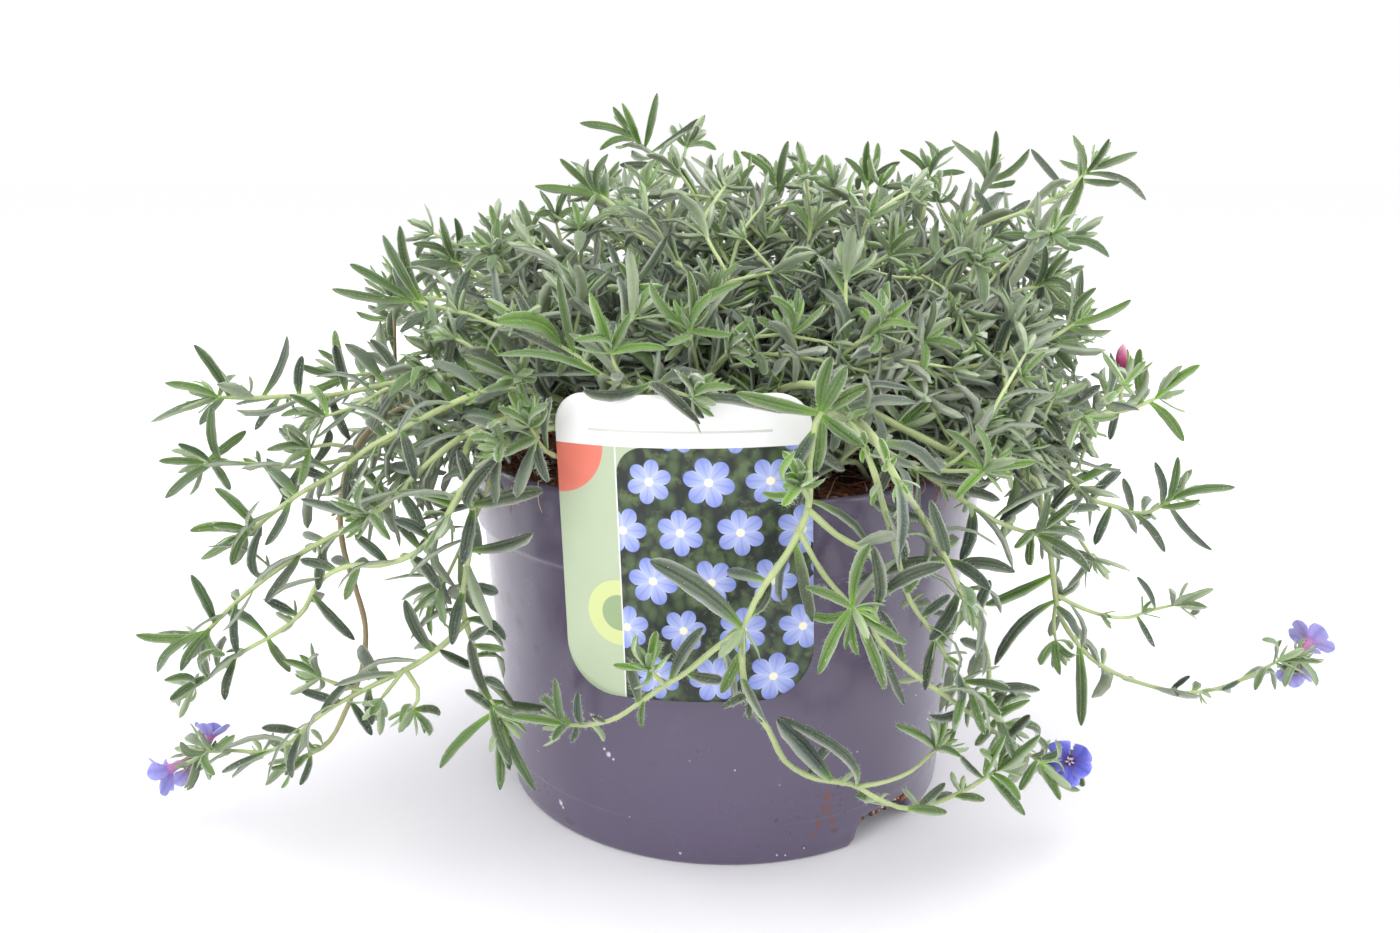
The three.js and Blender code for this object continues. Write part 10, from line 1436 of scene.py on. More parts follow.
-1017,-183,1302,42,10,0,0,32,91,26,477,-1052,-74,1043,34,4,5,0,-46,63,62,585,-971,70,1199,41,9,8,0,-38,-30,88,708,-1130,56,1162,37,4,8,0,27,37,89,807,-1032,131,1029,40,10,8,0,-38,68,62,904,-1104,193,1204,38,10,9,0,-19,
-64,74]},
{"n": "shoot_back_4", "r": [80, 55], "o": 0, "k": 1, "f": 0, "p": [[88,622,1222],[85,702,1219],[29,764,1139],[-13,826,1056]],
 "l": [1000,-31,906,1010,25,4,64,0,-33,41,85,986,-92,890,1060,27,8,51,0,17,20,96,972,25,874,945,30,10,48,0,-26,91,34,958,-86,952,1077,32,8,32,0,1,-8,100,943,-78,761,962,35,9,35,0,-84,41,36,929,90,935,1041,37,9,28,0,-40,
51,77,995,-19,885,1006,20,3,92,0,-36,57,73,995,-65,875,1030,20,3,81,0,-14,36,92,995,-38,831,994,20,3,82,0,-64,70,33,150,224,765,1210,37,11,2,0,-20,38,90,408,-50,761,1240,36,6,5,0,37,43,83,621,94,770,1028,40,11,10,0,-19,
98,3,786,-2,962,1101,42,4,11,0,-38,1,92]},
{"n": "shoot_back_7", "r": [80, 55], "o": 0, "k": 1, "f": 0, "p": [[650,300,1297],[762,321,1318],[890,261,1222],[1008,221,1121]],
 "l": [1000,1083,151,1060,25,8,57,0,55,-12,82,990,1123,228,1095,27,4,42,0,24,-25,94,981,1036,205,1023,28,5,49,0,88,-32,35,971,1110,131,1130,30,4,49,0,20,25,95,961,1092,303,1067,32,3,45,0,65,-19,74,951,993,106,1032,34,10,
29,0,68,-47,57,942,1123,231,1201,35,5,23,0,-36,-48,80,932,978,304,1005,37,2,32,0,96,27,11,995,1056,220,1063,20,3,77,0,75,-21,63,995,1055,168,1080,20,3,97,0,57,-12,81,995,1078,218,1115,20,3,78,0,9,-21,97,150,758,289,1457,
32,11,0,0,35,93,2,326,837,395,1223,35,7,3,0,76,4,64,460,832,136,1262,34,10,2,0,58,-6,81,617,1038,303,1265,30,7,10,0,-3,-54,84,736,931,216,1069,30,4,6,0,86,-46,22,852,1060,170,1202,34,9,15,0,-5,41,91]},
{"n": "shoot_back_1", "r": [80, 55], "o": 0, "k": 1, "f": 0, "p": [[-491,402,1251],[-566,457,1269],[-641,522,1179],[-712,581,1088]],
 "l": [1000,-794,597,1004,25,8,48,0,-60,44,67,988,-728,670,1012,27,4,41,0,-53,50,69,976,-810,618,1081,29,7,51,0,-2,26,96,963,-725,567,974,31,10,36,0,-85,52,11,951,-735,720,1097,33,2,40,0,-47,-8,88,939,-830,520,1074,35,9,
17,0,-37,49,79,927,-615,627,994,37,3,33,0,-21,92,33,995,-731,609,1036,20,3,99,0,-62,57,54,995,-750,633,1069,20,3,92,0,-31,13,94,995,-771,584,1066,20,3,85,0,-30,42,86,150,-544,579,1229,34,9,0,0,-37,17,91,372,-695,524,
1315,34,4,6,0,44,12,89,522,-626,428,1065,41,8,0,0,-97,22,1,725,-663,694,1138,35,8,7,0,-52,10,85,888,-837,545,1093,40,3,4,0,-20,49,85]},
{"n": "shoot_back_5", "r": [80, 55], "o": 0, "k": 1, "f": 0, "p": [[289,568,1235],[340,642,1253],[406,716,1183],[465,786,1110]],
 "l": [1000,485,857,1036,25,6,55,0,45,58,68,987,552,809,1061,27,8,47,0,33,49,81,974,492,895,1104,29,8,36,0,34,0,94,960,476,793,990,31,8,36,0,65,74,18,947,584,825,1142,33,6,37,0,-29,36,89,934,388,904,1072,35,9,23,0,43,51,
75,920,550,694,1032,37,3,12,0,77,34,54,995,512,814,1050,20,3,91,0,50,56,66,995,518,833,1099,20,3,87,0,4,19,98,995,465,849,1071,20,3,87,0,43,47,77,150,206,705,1283,32,12,0,0,48,20,85,351,325,707,1130,37,7,7,0,39,85,36,
554,532,699,1217,33,4,5,0,-7,54,84,707,395,868,1125,31,13,9,0,46,34,82,865,538,742,1018,37,6,17,0,71,51,49]},
{"n": "shoot_left_woody", "r": [80, 55], "o": 0, "k": 1, "f": 0, "p": [[-642,-168,1161],[-721,-182,1174],[-804,-187,1154],[-883,-193,1119]],
 "l": [1000,-975,-237,1063,25,9,52,0,-52,1,86,983,-970,-124,1099,27,7,55,0,-41,-27,87,966,-938,-209,1184,29,4,36,0,-69,-1,-72,948,-927,-206,1007,31,4,52,0,-89,-11,44,931,-987,-124,1167,33,7,31,0,-5,-58,81,914,-928,-322,
1110,35,8,18,0,-55,16,82,897,-898,-66,1008,37,8,27,0,-81,26,53,995,-943,-179,1084,20,3,92,0,-51,-9,85,995,-943,-195,1125,20,3,88,0,10,-4,99,995,-924,-227,1092,20,3,87,0,-55,2,83,150,-757,-120,1269,33,8,1,0,-3,-88,48,472,
-851,-287,1161,34,4,1,0,-37,28,89,676,-892,-86,1091,34,11,9,0,-62,-5,78]},
{"n": "shoot_back_3", "r": [70, 55], "o": 0, "k": 1, "f": 0, "p": [[-172,736,1131],[-201,782,1091],[-258,846,1112],[-306,903,1100]],
 "l": [1000,-359,996,1098,25,8,66,0,-12,-4,99,981,-387,940,1102,27,4,56,0,14,27,95,962,-342,983,1031,28,8,48,0,-39,47,79,925,-439,903,1053,32,9,36,0,-26,46,85,906,-260,1001,1047,34,3,36,0,-38,50,78,887,-391,920,1200,35,
8,35,0,65,59,48,868,-348,894,946,37,5,12,0,-72,62,32,995,-329,980,1102,20,3,95,0,-27,-9,96,995,-357,947,1125,20,3,77,0,37,-8,93,995,-355,940,1053,20,3,76,0,-40,47,79,150,-227,881,1169,33,8,0,0,-14,-46,87,470,-365,852,
1070,39,11,2,0,-9,28,96,749,-242,1018,1125,34,7,7,0,-50,1,87]},
{"n": "shoot_back_7", "r": [70, 55], "o": 0, "k": 1, "f": 0, "p": [[1015,411,1197],[1033,440,1158],[1025,512,1157],[1023,571,1132]],
 "l": [1000,1011,642,1075,25,10,54,0,-1,63,78,977,1067,680,1127,27,4,45,0,-26,16,95,954,951,669,1117,28,10,44,0,24,33,91,931,1079,638,1030,30,6,46,0,7,79,61,908,1032,682,1198,32,5,27,0,-16,-40,90,884,919,610,1035,34,3,
35,0,-19,77,61,861,1145,621,1123,35,4,32,0,-19,55,81,838,918,650,1225,37,9,24,0,73,25,64,995,1003,633,1124,20,3,95,0,16,19,97,995,1021,616,1089,20,3,92,0,-2,69,72,995,1049,626,1124,20,3,79,0,-24,26,94,150,1148,393,1128,
43,9,0,0,42,50,76,548,1006,549,1284,31,9,6,0,-8,89,-46]},
{"n": "shoot_back_8", "r": [80, 55], "o": 0, "k": 1, "f": 0, "p": [[-674,264,1306],[-739,283,1313],[-803,281,1235],[-864,285,1158]],
 "l": [1000,-928,323,1100,25,4,65,0,-66,4,75,984,-950,243,1110,27,5,60,0,-54,10,84,967,-870,311,1037,29,5,52,0,-96,24,14,951,-981,330,1157,31,5,39,0,-16,-18,97,935,-887,179,1084,33,6,42,0,-79,-23,57,919,-862,405,1101,35,
4,40,0,-71,32,62,902,-1008,221,1225,37,8,19,0,5,48,88,995,-892,277,1095,20,3,90,0,-91,0,41,995,-903,315,1121,20,3,93,0,-67,6,74,995,-924,266,1136,20,3,82,0,-39,14,91,150,-776,397,1327,31,7,1,0,-28,-25,92,459,-861,184,
1284,43,8,8,0,-38,33,86,709,-789,308,1055,35,12,12,0,-96,25,-8]},
{"n": "shoot_back_4", "r": [70, 55], "o": 0, "k": 1, "f": 0, "p": [[85,702,1219],[85,748,1185],[141,777,1148],[182,808,1097]],
 "l": [1000,217,888,1032,25,8,61,0,51,40,76,978,245,807,1010,27,7,59,0,73,44,53,957,262,880,1090,28,10,47,0,12,5,99,936,160,866,984,30,9,43,0,54,77,33,914,290,778,1070,32,5,36,0,37,45,81,893,193,945,1106,34,3,24,0,50,-3,
87,871,164,743,973,35,6,25,0,96,24,-11,850,303,829,1171,37,6,16,0,-40,40,83,995,236,838,1072,20,3,81,0,28,29,92,995,202,871,1049,20,3,85,0,52,41,75,995,217,806,1030,20,3,95,0,80,45,41,150,159,827,1225,34,5,1,0,-54,24,81,
566,141,875,1080,42,11,4,0,63,40,66]},
{"n": "shoot_left_front", "r": [80, 55], "o": 0, "k": 1, "f": 0, "p": [[-566,-560,1189],[-617,-582,1188],[-673,-553,1171],[-723,-536,1142]],
 "l": [1000,-798,-469,1092,25,7,58,0,-50,8,86,975,-823,-531,1142,27,5,55,0,-1,21,98,950,-779,-529,1041,28,10,36,0,-82,23,52,925,-794,-440,1157,30,7,45,0,-30,-33,90,900,-826,-611,1120,32,4,48,0,-42,34,84,875,-719,-443,
1042,34,9,41,0,-71,48,51,850,-828,-550,1229,35,4,19,0,38,58,72,825,-739,-643,1029,37,5,33,0,-90,-14,40,995,-769,-499,1106,20,3,94,0,-54,13,83,995,-787,-529,1136,20,3,81,0,-8,17,98,995,-776,-552,1100,20,3,97,0,-64,20,74,
150,-720,-527,1189,35,9,7,0,-21,-45,87,609,-780,-517,1246,30,13,4,0,55,13,83]},
{"n": "shoot_right_drop", "r": [80, 55], "o": 0, "k": 1, "f": 0, "p": [[877,-392,1059],[951,-333,1002],[1035,-188,1127],[1113,-70,1169]],
 "l": [991,1199,-5,1173,27,8,49,0,-14,12,98,972,1127,46,1144,30,10,39,0,23,13,96,963,1226,-61,1215,32,4,37,0,-41,39,82,954,1090,21,1202,34,8,35,0,44,-26,86,944,1159,6,1083,35,7,23,0,32,48,82,935,1197,-101,1271,37,9,26,0,
-45,76,47,995,1151,-20,1166,20,3,81,0,0,5,100,995,1171,-44,1212,20,3,76,0,-64,19,75,995,1126,-6,1186,20,3,94,0,17,-28,94,150,898,-233,978,30,5,0,0,56,30,77,321,1042,-260,950,31,4,0,0,23,32,92,486,1001,-284,1223,31,6,0,0,
27,96,5,635,1012,-62,1141,30,4,8,0,27,-13,95,739,1184,-103,1161,35,7,12,0,-24,21,95,865,1043,-31,1175,31,11,9,0,49,3,87]},
{"n": "shoot_back_1", "r": [70, 55], "o": 0, "k": 1, "f": 0, "p": [[-666,542,1149],[-677,578,1124],[-642,643,1145],[-619,698,1141]],
 "l": [1000,-603,798,1169,25,5,53,0,16,-29,94,976,-623,779,1143,27,6,52,0,28,-1,96,952,-542,760,1193,30,6,49,0,-59,9,80,928,-688,779,1108,32,6,41,0,26,48,84,904,-504,731,1073,35,9,36,0,24,55,80,880,-612,771,1294,37,9,32,
0,36,78,-51,995,-569,756,1143,20,3,92,0,-19,13,97,995,-604,773,1157,20,3,96,0,11,-23,97,995,-616,764,1115,20,3,81,0,21,34,92,150,-815,565,1093,37,12,0,0,-20,59,78,591,-523,657,1128,39,7,6,0,1,37,93]},
{"n": "shoot_back_6", "r": [70, 55], "o": 0, "k": 1, "f": 0, "p": [[646,730,1327],[666,779,1325],[703,806,1257],[732,836,1192]],
 "l": [1000,798,912,1129,25,10,68,0,37,38,85,979,716,875,1079,27,4,57,0,46,85,24,958,845,829,1129,30,9,38,0,47,46,75,937,730,972,1162,32,5,34,0,44,25,86,916,714,756,1071,35,6,28,0,99,8,-12,896,862,888,1238,37,5,25,0,-28,
25,93,995,747,888,1138,20,3,96,0,47,57,68,995,749,838,1119,20,3,95,0,75,63,20,995,787,858,1163,20,3,83,0,29,40,87,150,795,816,1357,35,7,8,0,-34,36,87,487,735,939,1274,39,10,0,0,44,-1,90,735,700,784,1120,41,5,6,0,83,52,
-18]},
{"n": "shoot_left_woody", "r": [70, 55], "o": 0, "k": 1, "f": 0, "p": [[-852,-197,1172],[-899,-173,1172],[-924,-114,1200],[-952,-66,1206]],
 "l": [1000,-974,34,1240,25,5,47,0,-19,-36,92,976,-1034,-21,1207,27,7,54,0,16,25,95,951,-936,28,1177,28,8,60,0,-31,28,91,902,-1068,-34,1170,32,3,34,0,-10,40,91,878,-899,40,1247,34,9,42,0,-57,-9,81,853,-1034,-66,1308,35,
9,37,0,60,68,42,829,-960,2,1069,37,8,20,0,-36,74,57,995,-990,-8,1196,20,3,93,0,-5,12,99,995,-957,-11,1224,20,3,78,0,-31,-32,90,995,-1007,-30,1239,20,3,98,0,56,10,82,150,-929,-61,1215,31,5,0,0,-38,-45,81,559,-1019,-125,
1324,40,5,3,0,64,63,44]},
{"n": "shoot_right_drop", "r": [80, 55], "o": 0, "k": 1, "f": 0, "p": [[788,-418,1170],[839,-430,1162],[850,-518,1195],[865,-584,1200]],
 "l": [896,807,-663,1211,35,7,29,0,42,-13,90,995,863,-659,1201,20,3,93,0,18,2,98,150,883,-529,1135,34,12,0,0,56,6,83]},
{"n": "shoot_back_3", "r": [70, 55], "o": 0, "k": 1, "f": 0, "p": [[-249,836,1110],[-256,877,1131],[-171,899,1183],[-111,924,1209]],
 "l": [1000,-27,982,1227,25,6,50,0,-9,-18,98,980,-14,914,1268,27,8,58,0,-45,41,80,960,-71,1004,1277,29,7,44,0,16,-69,70,940,5,941,1177,31,3,28,0,19,15,97,920,-66,906,1332,33,5,44,0,5,100,7,901,-87,1053,1197,35,9,25,0,35,
-7,93,881,0,824,1207,37,2,13,0,20,35,91,995,-44,929,1248,20,3,78,0,-51,22,83,995,-69,961,1266,20,3,86,0,-25,-71,65,995,-55,958,1206,20,3,84,0,5,-4,100,150,-370,869,1145,40,8,0,0,26,41,88,448,-135,814,1207,42,7,0,0,-10,
56,83,703,-115,992,1333,37,7,9,0,39,-84,39]},
{"n": "shoot_back_7", "r": [70, 55], "o": 0, "k": 1, "f": 0, "p": [[960,380,1302],[1000,388,1270],[1063,381,1277],[1117,377,1260]],
 "l": [1000,1226,378,1269,25,5,58,0,-8,-7,99,974,1140,376,1175,27,9,49,0,95,-6,30,949,1190,292,1257,30,8,48,0,37,30,88,923,1211,445,1300,32,6,45,0,8,-57,82,898,1143,349,1127,35,5,34,0,93,-17,32,872,1191,305,1365,37,5,32,
0,18,86,47,995,1181,393,1253,20,3,95,0,16,-19,97,995,1172,348,1261,20,3,78,0,14,28,95,150,1016,535,1218,42,10,0,0,65,17,74,622,1144,266,1279,38,9,8,0,32,27,91]},
{"n": "shoot_back_1", "r": [70, 55], "o": 0, "k": 1, "f": 0, "p": [[-630,512,1196],[-672,530,1173],[-741,525,1214],[-801,526,1224]],
 "l": [1000,-883,551,1265,25,6,49,0,33,-36,87,955,-910,581,1202,28,9,35,0,-24,-14,96,932,-882,523,1328,30,8,36,0,73,22,65,910,-908,460,1165,32,8,41,0,-45,6,89,887,-861,629,1262,34,4,32,0,-24,-50,83,864,-859,417,1322,35,
8,16,0,-25,75,61,842,-864,564,1105,37,4,34,0,-77,10,63,995,-865,550,1254,20,3,81,0,26,-39,88,995,-876,494,1245,20,3,76,0,10,36,93,995,-858,542,1210,20,3,95,0,-25,-7,97,150,-796,465,1149,37,8,0,0,-34,42,84,461,-835,591,
1164,34,7,0,0,-20,-11,97]},
{"n": "shoot_back_4", "r": [70, 55], "o": 0, "k": 1, "f": 0, "p": [[216,878,1168],[256,901,1151],[317,912,1193],[370,924,1206]],
 "l": [1000,471,913,1237,25,3,53,0,-25,28,93,976,453,986,1272,27,8,51,0,-18,-58,79,952,469,941,1173,28,7,54,0,26,8,96,927,455,898,1299,30,5,54,0,-39,72,57,903,430,1038,1215,32,9,37,0,29,-28,92,879,488,840,1174,34,4,33,0,
32,23,92,855,398,969,1352,35,9,20,0,76,-65,-4,830,429,1008,1097,37,3,33,0,63,25,74,995,429,926,1241,20,3,100,0,-51,19,84,995,423,967,1228,20,3,85,0,-5,-42,91,995,429,925,1197,20,3,92,0,13,12,98,150,367,902,1211,33,5,0,0,
-36,50,79,599,375,1020,1231,32,4,5,0,11,-43,89]},
{"n": "shoot_left_mid", "r": [80, 55], "o": 0, "k": 1, "f": 0, "p": [[-576,-446,1213],[-647,-460,1231],[-721,-363,1243],[-791,-295,1230]],
 "l": [1000,-840,-209,1244,25,4,55,0,-14,-23,96,985,-873,-259,1280,27,5,44,0,55,17,82,971,-832,-226,1165,28,4,49,0,-45,42,79,956,-852,-246,1292,30,6,50,0,49,-26,83,941,-899,-302,1170,32,5,28,0,-41,40,82,927,-765,-171,
1230,34,4,25,0,-49,6,87,912,-888,-329,1298,35,3,23,0,26,71,66,897,-809,-272,1073,37,9,31,0,-68,65,34,995,-825,-230,1226,20,3,94,0,-22,-5,97,995,-845,-260,1254,20,3,80,0,37,-3,93,995,-855,-268,1196,20,3,76,0,-32,36,88,
150,-723,-406,1141,31,4,0,0,-62,-9,78,353,-591,-354,1230,41,5,0,0,-44,27,86,604,-858,-362,1249,43,8,2,0,9,42,90,784,-759,-204,1203,42,11,3,0,-41,21,89]},
{"n": "shoot_back_3", "r": [70, 55], "o": 0, "k": 1, "f": 0, "p": [[-194,773,1094],[-242,804,1096],[-311,773,1172],[-371,757,1209]],
 "l": [1000,-438,726,1269,25,7,63,0,49,41,77,982,-487,771,1241,27,6,40,0,24,-21,95,945,-461,684,1204,31,5,52,0,-10,14,98,926,-452,826,1256,33,4,24,0,9,-55,83,908,-416,760,1323,35,7,23,0,-84,-33,-42,890,-507,771,1118,37,
6,10,0,-46,-9,88,995,-419,739,1272,20,3,79,0,66,41,62,995,-435,718,1228,20,3,77,0,14,25,96,995,-443,775,1215,20,3,91,0,4,-23,97,150,-261,855,1206,31,11,0,0,-79,-61,2,485,-352,670,1156,41,8,8,0,-3,24,97]},
{"n": "shoot_front_star_1", "r": [80, 55], "o": 0, "k": 1, "f": 0, "p": [[-43,-470,1140],[-57,-502,1170],[-84,-565,1152],[-107,-618,1131]],
 "l": [1000,-173,-686,1115,25,9,65,0,7,-28,96,976,-104,-746,1137,27,9,41,0,-33,3,94,952,-214,-653,1094,30,6,50,0,-10,-53,84,927,-120,-722,1157,32,9,44,0,-21,21,95,903,-13,-721,1076,35,7,26,0,-25,-58,77,879,-191,-625,
1228,37,7,25,0,57,-73,38,995,-134,-690,1136,20,3,77,0,-2,8,100,995,-108,-673,1100,20,3,84,0,-25,-46,85,995,-152,-638,1103,20,3,92,0,-23,-57,79,150,-70,-618,1176,42,11,0,0,-7,15,99,634,-115,-627,1088,32,5,8,0,-26,-60,
75]},
{"n": "shoot_back_6", "r": [70, 55], "o": 0, "k": 1, "f": 0, "p": [[656,746,1317],[704,798,1325],[812,729,1318],[901,688,1290]],
 "l": [1000,1005,681,1256,25,4,46,0,28,-25,93,985,956,603,1256,27,9,47,0,45,-6,89,970,997,675,1325,28,3,47,0,-33,-23,92,955,975,680,1189,30,6,54,0,72,-28,63,940,946,589,1328,32,6,32,0,33,45,83,926,1019,765,1302,34,7,27,
0,21,-49,85,911,891,593,1180,35,8,21,0,65,-53,55,896,969,648,1424,37,3,21,0,70,-28,-65,995,959,653,1252,20,3,87,0,45,-18,87,995,948,648,1298,20,3,78,0,5,26,96,995,979,696,1286,20,3,81,0,8,-35,93,150,715,875,1435,39,7,6,
0,37,-76,53,414,850,802,1201,32,5,0,0,70,-26,67,592,793,589,1384,42,10,4,0,58,32,75,783,976,750,1343,36,4,15,0,-5,-57,82]},
{"n": "shoot_left_level", "r": [80, 55], "o": 0, "k": 1, "f": 0, "p": [[-424,-399,1263],[-464,-433,1272],[-510,-467,1259],[-551,-500,1238]],
 "l": [1000,-640,-536,1233,25,5,69,0,3,-21,98,974,-590,-604,1214,27,2,52,0,-40,-6,91,948,-639,-495,1162,30,10,42,0,-59,-40,71,922,-633,-568,1307,32,3,32,0,33,35,88,896,-557,-616,1248,35,2,37,0,-50,9,86,870,-694,-414,
1254,37,6,14,0,-22,-56,80,995,-586,-543,1203,20,3,81,0,-44,-31,84,995,-613,-512,1219,20,3,94,0,-20,-35,92,995,-599,-557,1252,20,3,96,0,-5,27,96,150,-592,-395,1203,38,4,0,0,-42,-31,85,594,-594,-522,1297,38,7,3,0,28,10,
96]},
{"n": "shoot_back_5", "r": [70, 55], "o": 0, "k": 1, "f": 0, "p": [[459,738,1374],[501,768,1378],[530,804,1317],[561,835,1258]],
 "l": [1000,596,909,1205,25,6,63,0,43,39,82,978,579,839,1143,27,2,61,0,75,64,16,956,667,877,1237,30,8,47,0,11,33,94,934,510,938,1185,32,8,40,0,40,66,64,912,635,748,1180,35,10,28,0,82,23,53,890,622,951,1315,37,3,29,0,15,
-35,92,995,604,844,1198,20,3,79,0,66,51,55,995,604,880,1232,20,3,99,0,29,27,92,995,553,880,1189,20,3,80,0,47,76,45,150,515,839,1506,36,5,0,0,61,-73,31,553,495,784,1182,35,10,7,0,45,89,-11]},
{"n": "shoot_back_3", "r": [70, 55], "o": 0, "k": 1, "f": 0, "p": [[-290,885,1106],[-310,916,1121],[-292,920,1209],[-283,930,1262]],
 "l": [1000,-261,971,1340,25,7,70,0,-39,-76,51,977,-267,896,1351,27,3,47,0,-21,91,37,953,-338,989,1374,30,4,48,0,68,-49,55,930,-181,967,1338,32,4,44,0,-60,-14,79,906,-337,850,1379,35,7,19,0,46,68,58,883,-299,1092,1312,
37,4,27,0,10,-37,92,995,-294,939,1330,20,3,86,0,97,-20,17,995,-269,961,1311,20,3,84,0,-32,-76,56,995,-258,922,1329,20,3,94,0,-78,52,36,150,-292,982,1218,43,3,0,0,-89,-32,31,536,-293,813,1294,30,11,6,0,9,75,65]},
{"n": "shoot_back_8", "r": [70, 55], "o": 0, "k": 1, "f": 0, "p": [[-742,362,1318],[-786,411,1344],[-835,390,1315],[-880,380,1275]],
 "l": [1000,-948,326,1217,25,9,67,0,-60,-10,79,975,-942,415,1187,27,5,61,0,-82,-6,56,949,-989,350,1284,30,5,52,0,1,7,100,924,-875,317,1169,32,9,36,0,-81,-49,32,899,-975,489,1263,35,7,35,0,-50,-31,81,874,-944,238,1316,37,
2,15,0,-47,40,79,995,-918,376,1218,20,3,79,0,-82,-16,56,995,-952,390,1252,20,3,97,0,-33,-20,92,995,-920,345,1239,20,3,77,0,-61,-10,78,150,-874,411,1447,36,12,0,0,46,75,48,593,-870,370,1198,38,3,4,0,-83,-41,39]},
{"n": "shoot_back_12", "r": [70, 55], "o": 0, "k": 1, "f": 0, "p": [[649,-5,1438],[725,14,1469],[843,-43,1386],[945,-79,1304]],
 "l": [1000,1014,-89,1252,25,10,55,0,57,-21,80,977,980,-176,1236,30,4,38,0,65,-26,72,965,1061,-28,1317,32,6,35,0,14,-48,86,954,937,-40,1160,35,2,24,0,100,-8,2,942,990,-218,1355,37,3,13,0,50,41,76,150,835,-10,1431,42,12,
0,0,19,19,96,369,886,27,1517,38,4,0,0,-25,-47,85,558,918,39,1319,36,5,2,0,71,-26,66,731,863,-178,1267,32,13,11,0,64,-48,59]},
{"n": "shoot_back_2", "r": [70, 55], "o": 0, "k": 1, "f": 0, "p": [[-474,735,1211],[-513,747,1213],[-525,781,1293],[-542,809,1338]],
 "l": [976,-581,904,1402,27,8,42,0,14,-52,84,953,-531,826,1440,28,7,58,0,-99,15,5,929,-609,890,1356,30,6,33,0,17,-16,97,906,-509,908,1394,32,9,29,0,-39,-42,82,882,-570,760,1448,34,6,26,0,14,93,33,858,-643,917,1325,35,6,
38,0,5,1,100,835,-434,837,1438,37,5,30,0,-78,6,62,995,-558,865,1381,20,3,91,0,5,-60,79,995,-529,832,1412,20,3,84,0,-95,-21,24,150,-521,771,1098,32,5,0,0,-88,35,32,606,-543,904,1361,39,7,10,0,5,-53,85]},
{"n": "shoot_back_7", "r": [70, 55], "o": 0, "k": 1, "f": 0, "p": [[694,411,1376],[709,492,1398],[689,589,1370],[677,678,1331]],
 "l": [1000,681,758,1269,25,4,50,0,-8,61,79,985,720,784,1301,27,9,48,0,-22,34,91,970,609,785,1346,28,5,52,0,34,10,94,954,679,734,1221,30,10,47,0,-8,86,51,939,720,788,1383,32,9,38,0,-52,-13,84,924,584,738,1340,34,4,28,0,
32,38,87,909,791,720,1257,35,2,17,0,7,74,67,894,631,758,1447,37,8,22,0,86,-9,51,995,687,734,1334,20,3,91,0,-25,-1,97,150,705,526,1543,40,5,0,0,22,86,-45,356,615,588,1280,33,11,3,0,-18,71,68,593,775,705,1396,43,6,4,0,-49,
18,85,808,609,723,1366,42,11,13,0,39,18,90]},
{"n": "shoot_back_8", "r": [70, 55], "o": 0, "k": 1, "f": 0, "p": [[-717,278,1318],[-786,264,1314],[-825,160,1337],[-868,82,1331]],
 "l": [1000,-920,4,1299,25,8,49,0,-14,-29,95,984,-943,4,1379,27,6,48,0,44,10,89,968,-847,-16,1328,28,3,39,0,-39,-9,92,952,-972,47,1314,30,8,52,0,2,-40,92,936,-882,-10,1424,32,8,42,0,-44,64,63,920,-862,3,1229,34,2,32,0,
-31,-69,65,904,-987,85,1392,35,5,25,0,40,-56,72,888,-767,-40,1389,37,10,15,0,-64,-9,76,995,-884,0,1327,20,3,99,0,-21,0,98,995,-921,32,1309,20,3,82,0,-8,-32,94,995,-892,13,1352,20,3,100,0,-5,31,95,150,-846,309,1243,41,12,
0,0,-60,-2,80,457,-871,194,1431,32,4,1,0,78,-54,31,714,-767,1,1361,31,11,2,0,-48,-7,87]},
{"n": "shoot_right_drop", "r": [80, 55], "o": 0, "k": 1, "f": 0, "p": [[672,-425,1187],[710,-457,1216],[711,-509,1269],[721,-551,1299]],
 "l": [150,805,-518,1151,41,9,0,0,36,-8,93]},
{"n": "shoot_left_low_1", "r": [80, 55], "o": 0, "k": 1, "f": 0, "p": [[-364,-432,1163],[-383,-458,1209],[-387,-485,1267],[-396,-511,1304]],
 "l": [1000,-437,-582,1352,25,8,56,0,32,40,86,947,-336,-559,1369,28,4,47,0,-70,17,69,920,-447,-590,1322,30,9,40,0,19,18,97,893,-349,-513,1429,32,7,26,0,-86,-44,25,866,-415,-647,1312,34,4,34,0,-3,15,99,840,-488,-460,1415,
35,5,16,0,52,-62,58,813,-270,-564,1369,37,4,23,0,-58,-1,81,995,-425,-566,1339,20,3,88,0,29,40,87,150,-325,-578,1277,41,9,0,0,-48,37,79,619,-505,-504,1330,41,3,9,0,52,-11,84]},
{"n": "shoot_back_8", "r": [70, 55], "o": 0, "k": 1, "f": 0, "p": [[-718,480,1434],[-734,522,1436],[-793,539,1404],[-839,560,1367]],
 "l": [1000,-948,604,1347,25,3,50,0,-14,11,98,975,-899,558,1285,27,6,45,0,-77,30,57,951,-853,668,1337,29,3,41,0,-58,15,80,926,-952,531,1364,31,4,49,0,-17,43,89,901,-822,601,1242,33,4,26,0,-74,64,20,877,-915,643,1435,35,
4,25,0,-5,-55,84,852,-900,435,1303,37,7,25,0,-77,10,63,995,-894,578,1366,20,3,79,0,1,12,99,995,-895,544,1352,20,3,80,0,-35,38,86,150,-822,536,1513,41,8,0,0,64,46,62,603,-828,598,1282,33,4,2,0,-82,35,46]},
{"n": "shoot_front_star_1", "r": [80, 55], "o": 0, "k": 1, "f": 0, "p": [[-58,-509,1209],[-82,-538,1248],[-128,-575,1271],[-166,-609,1281]],
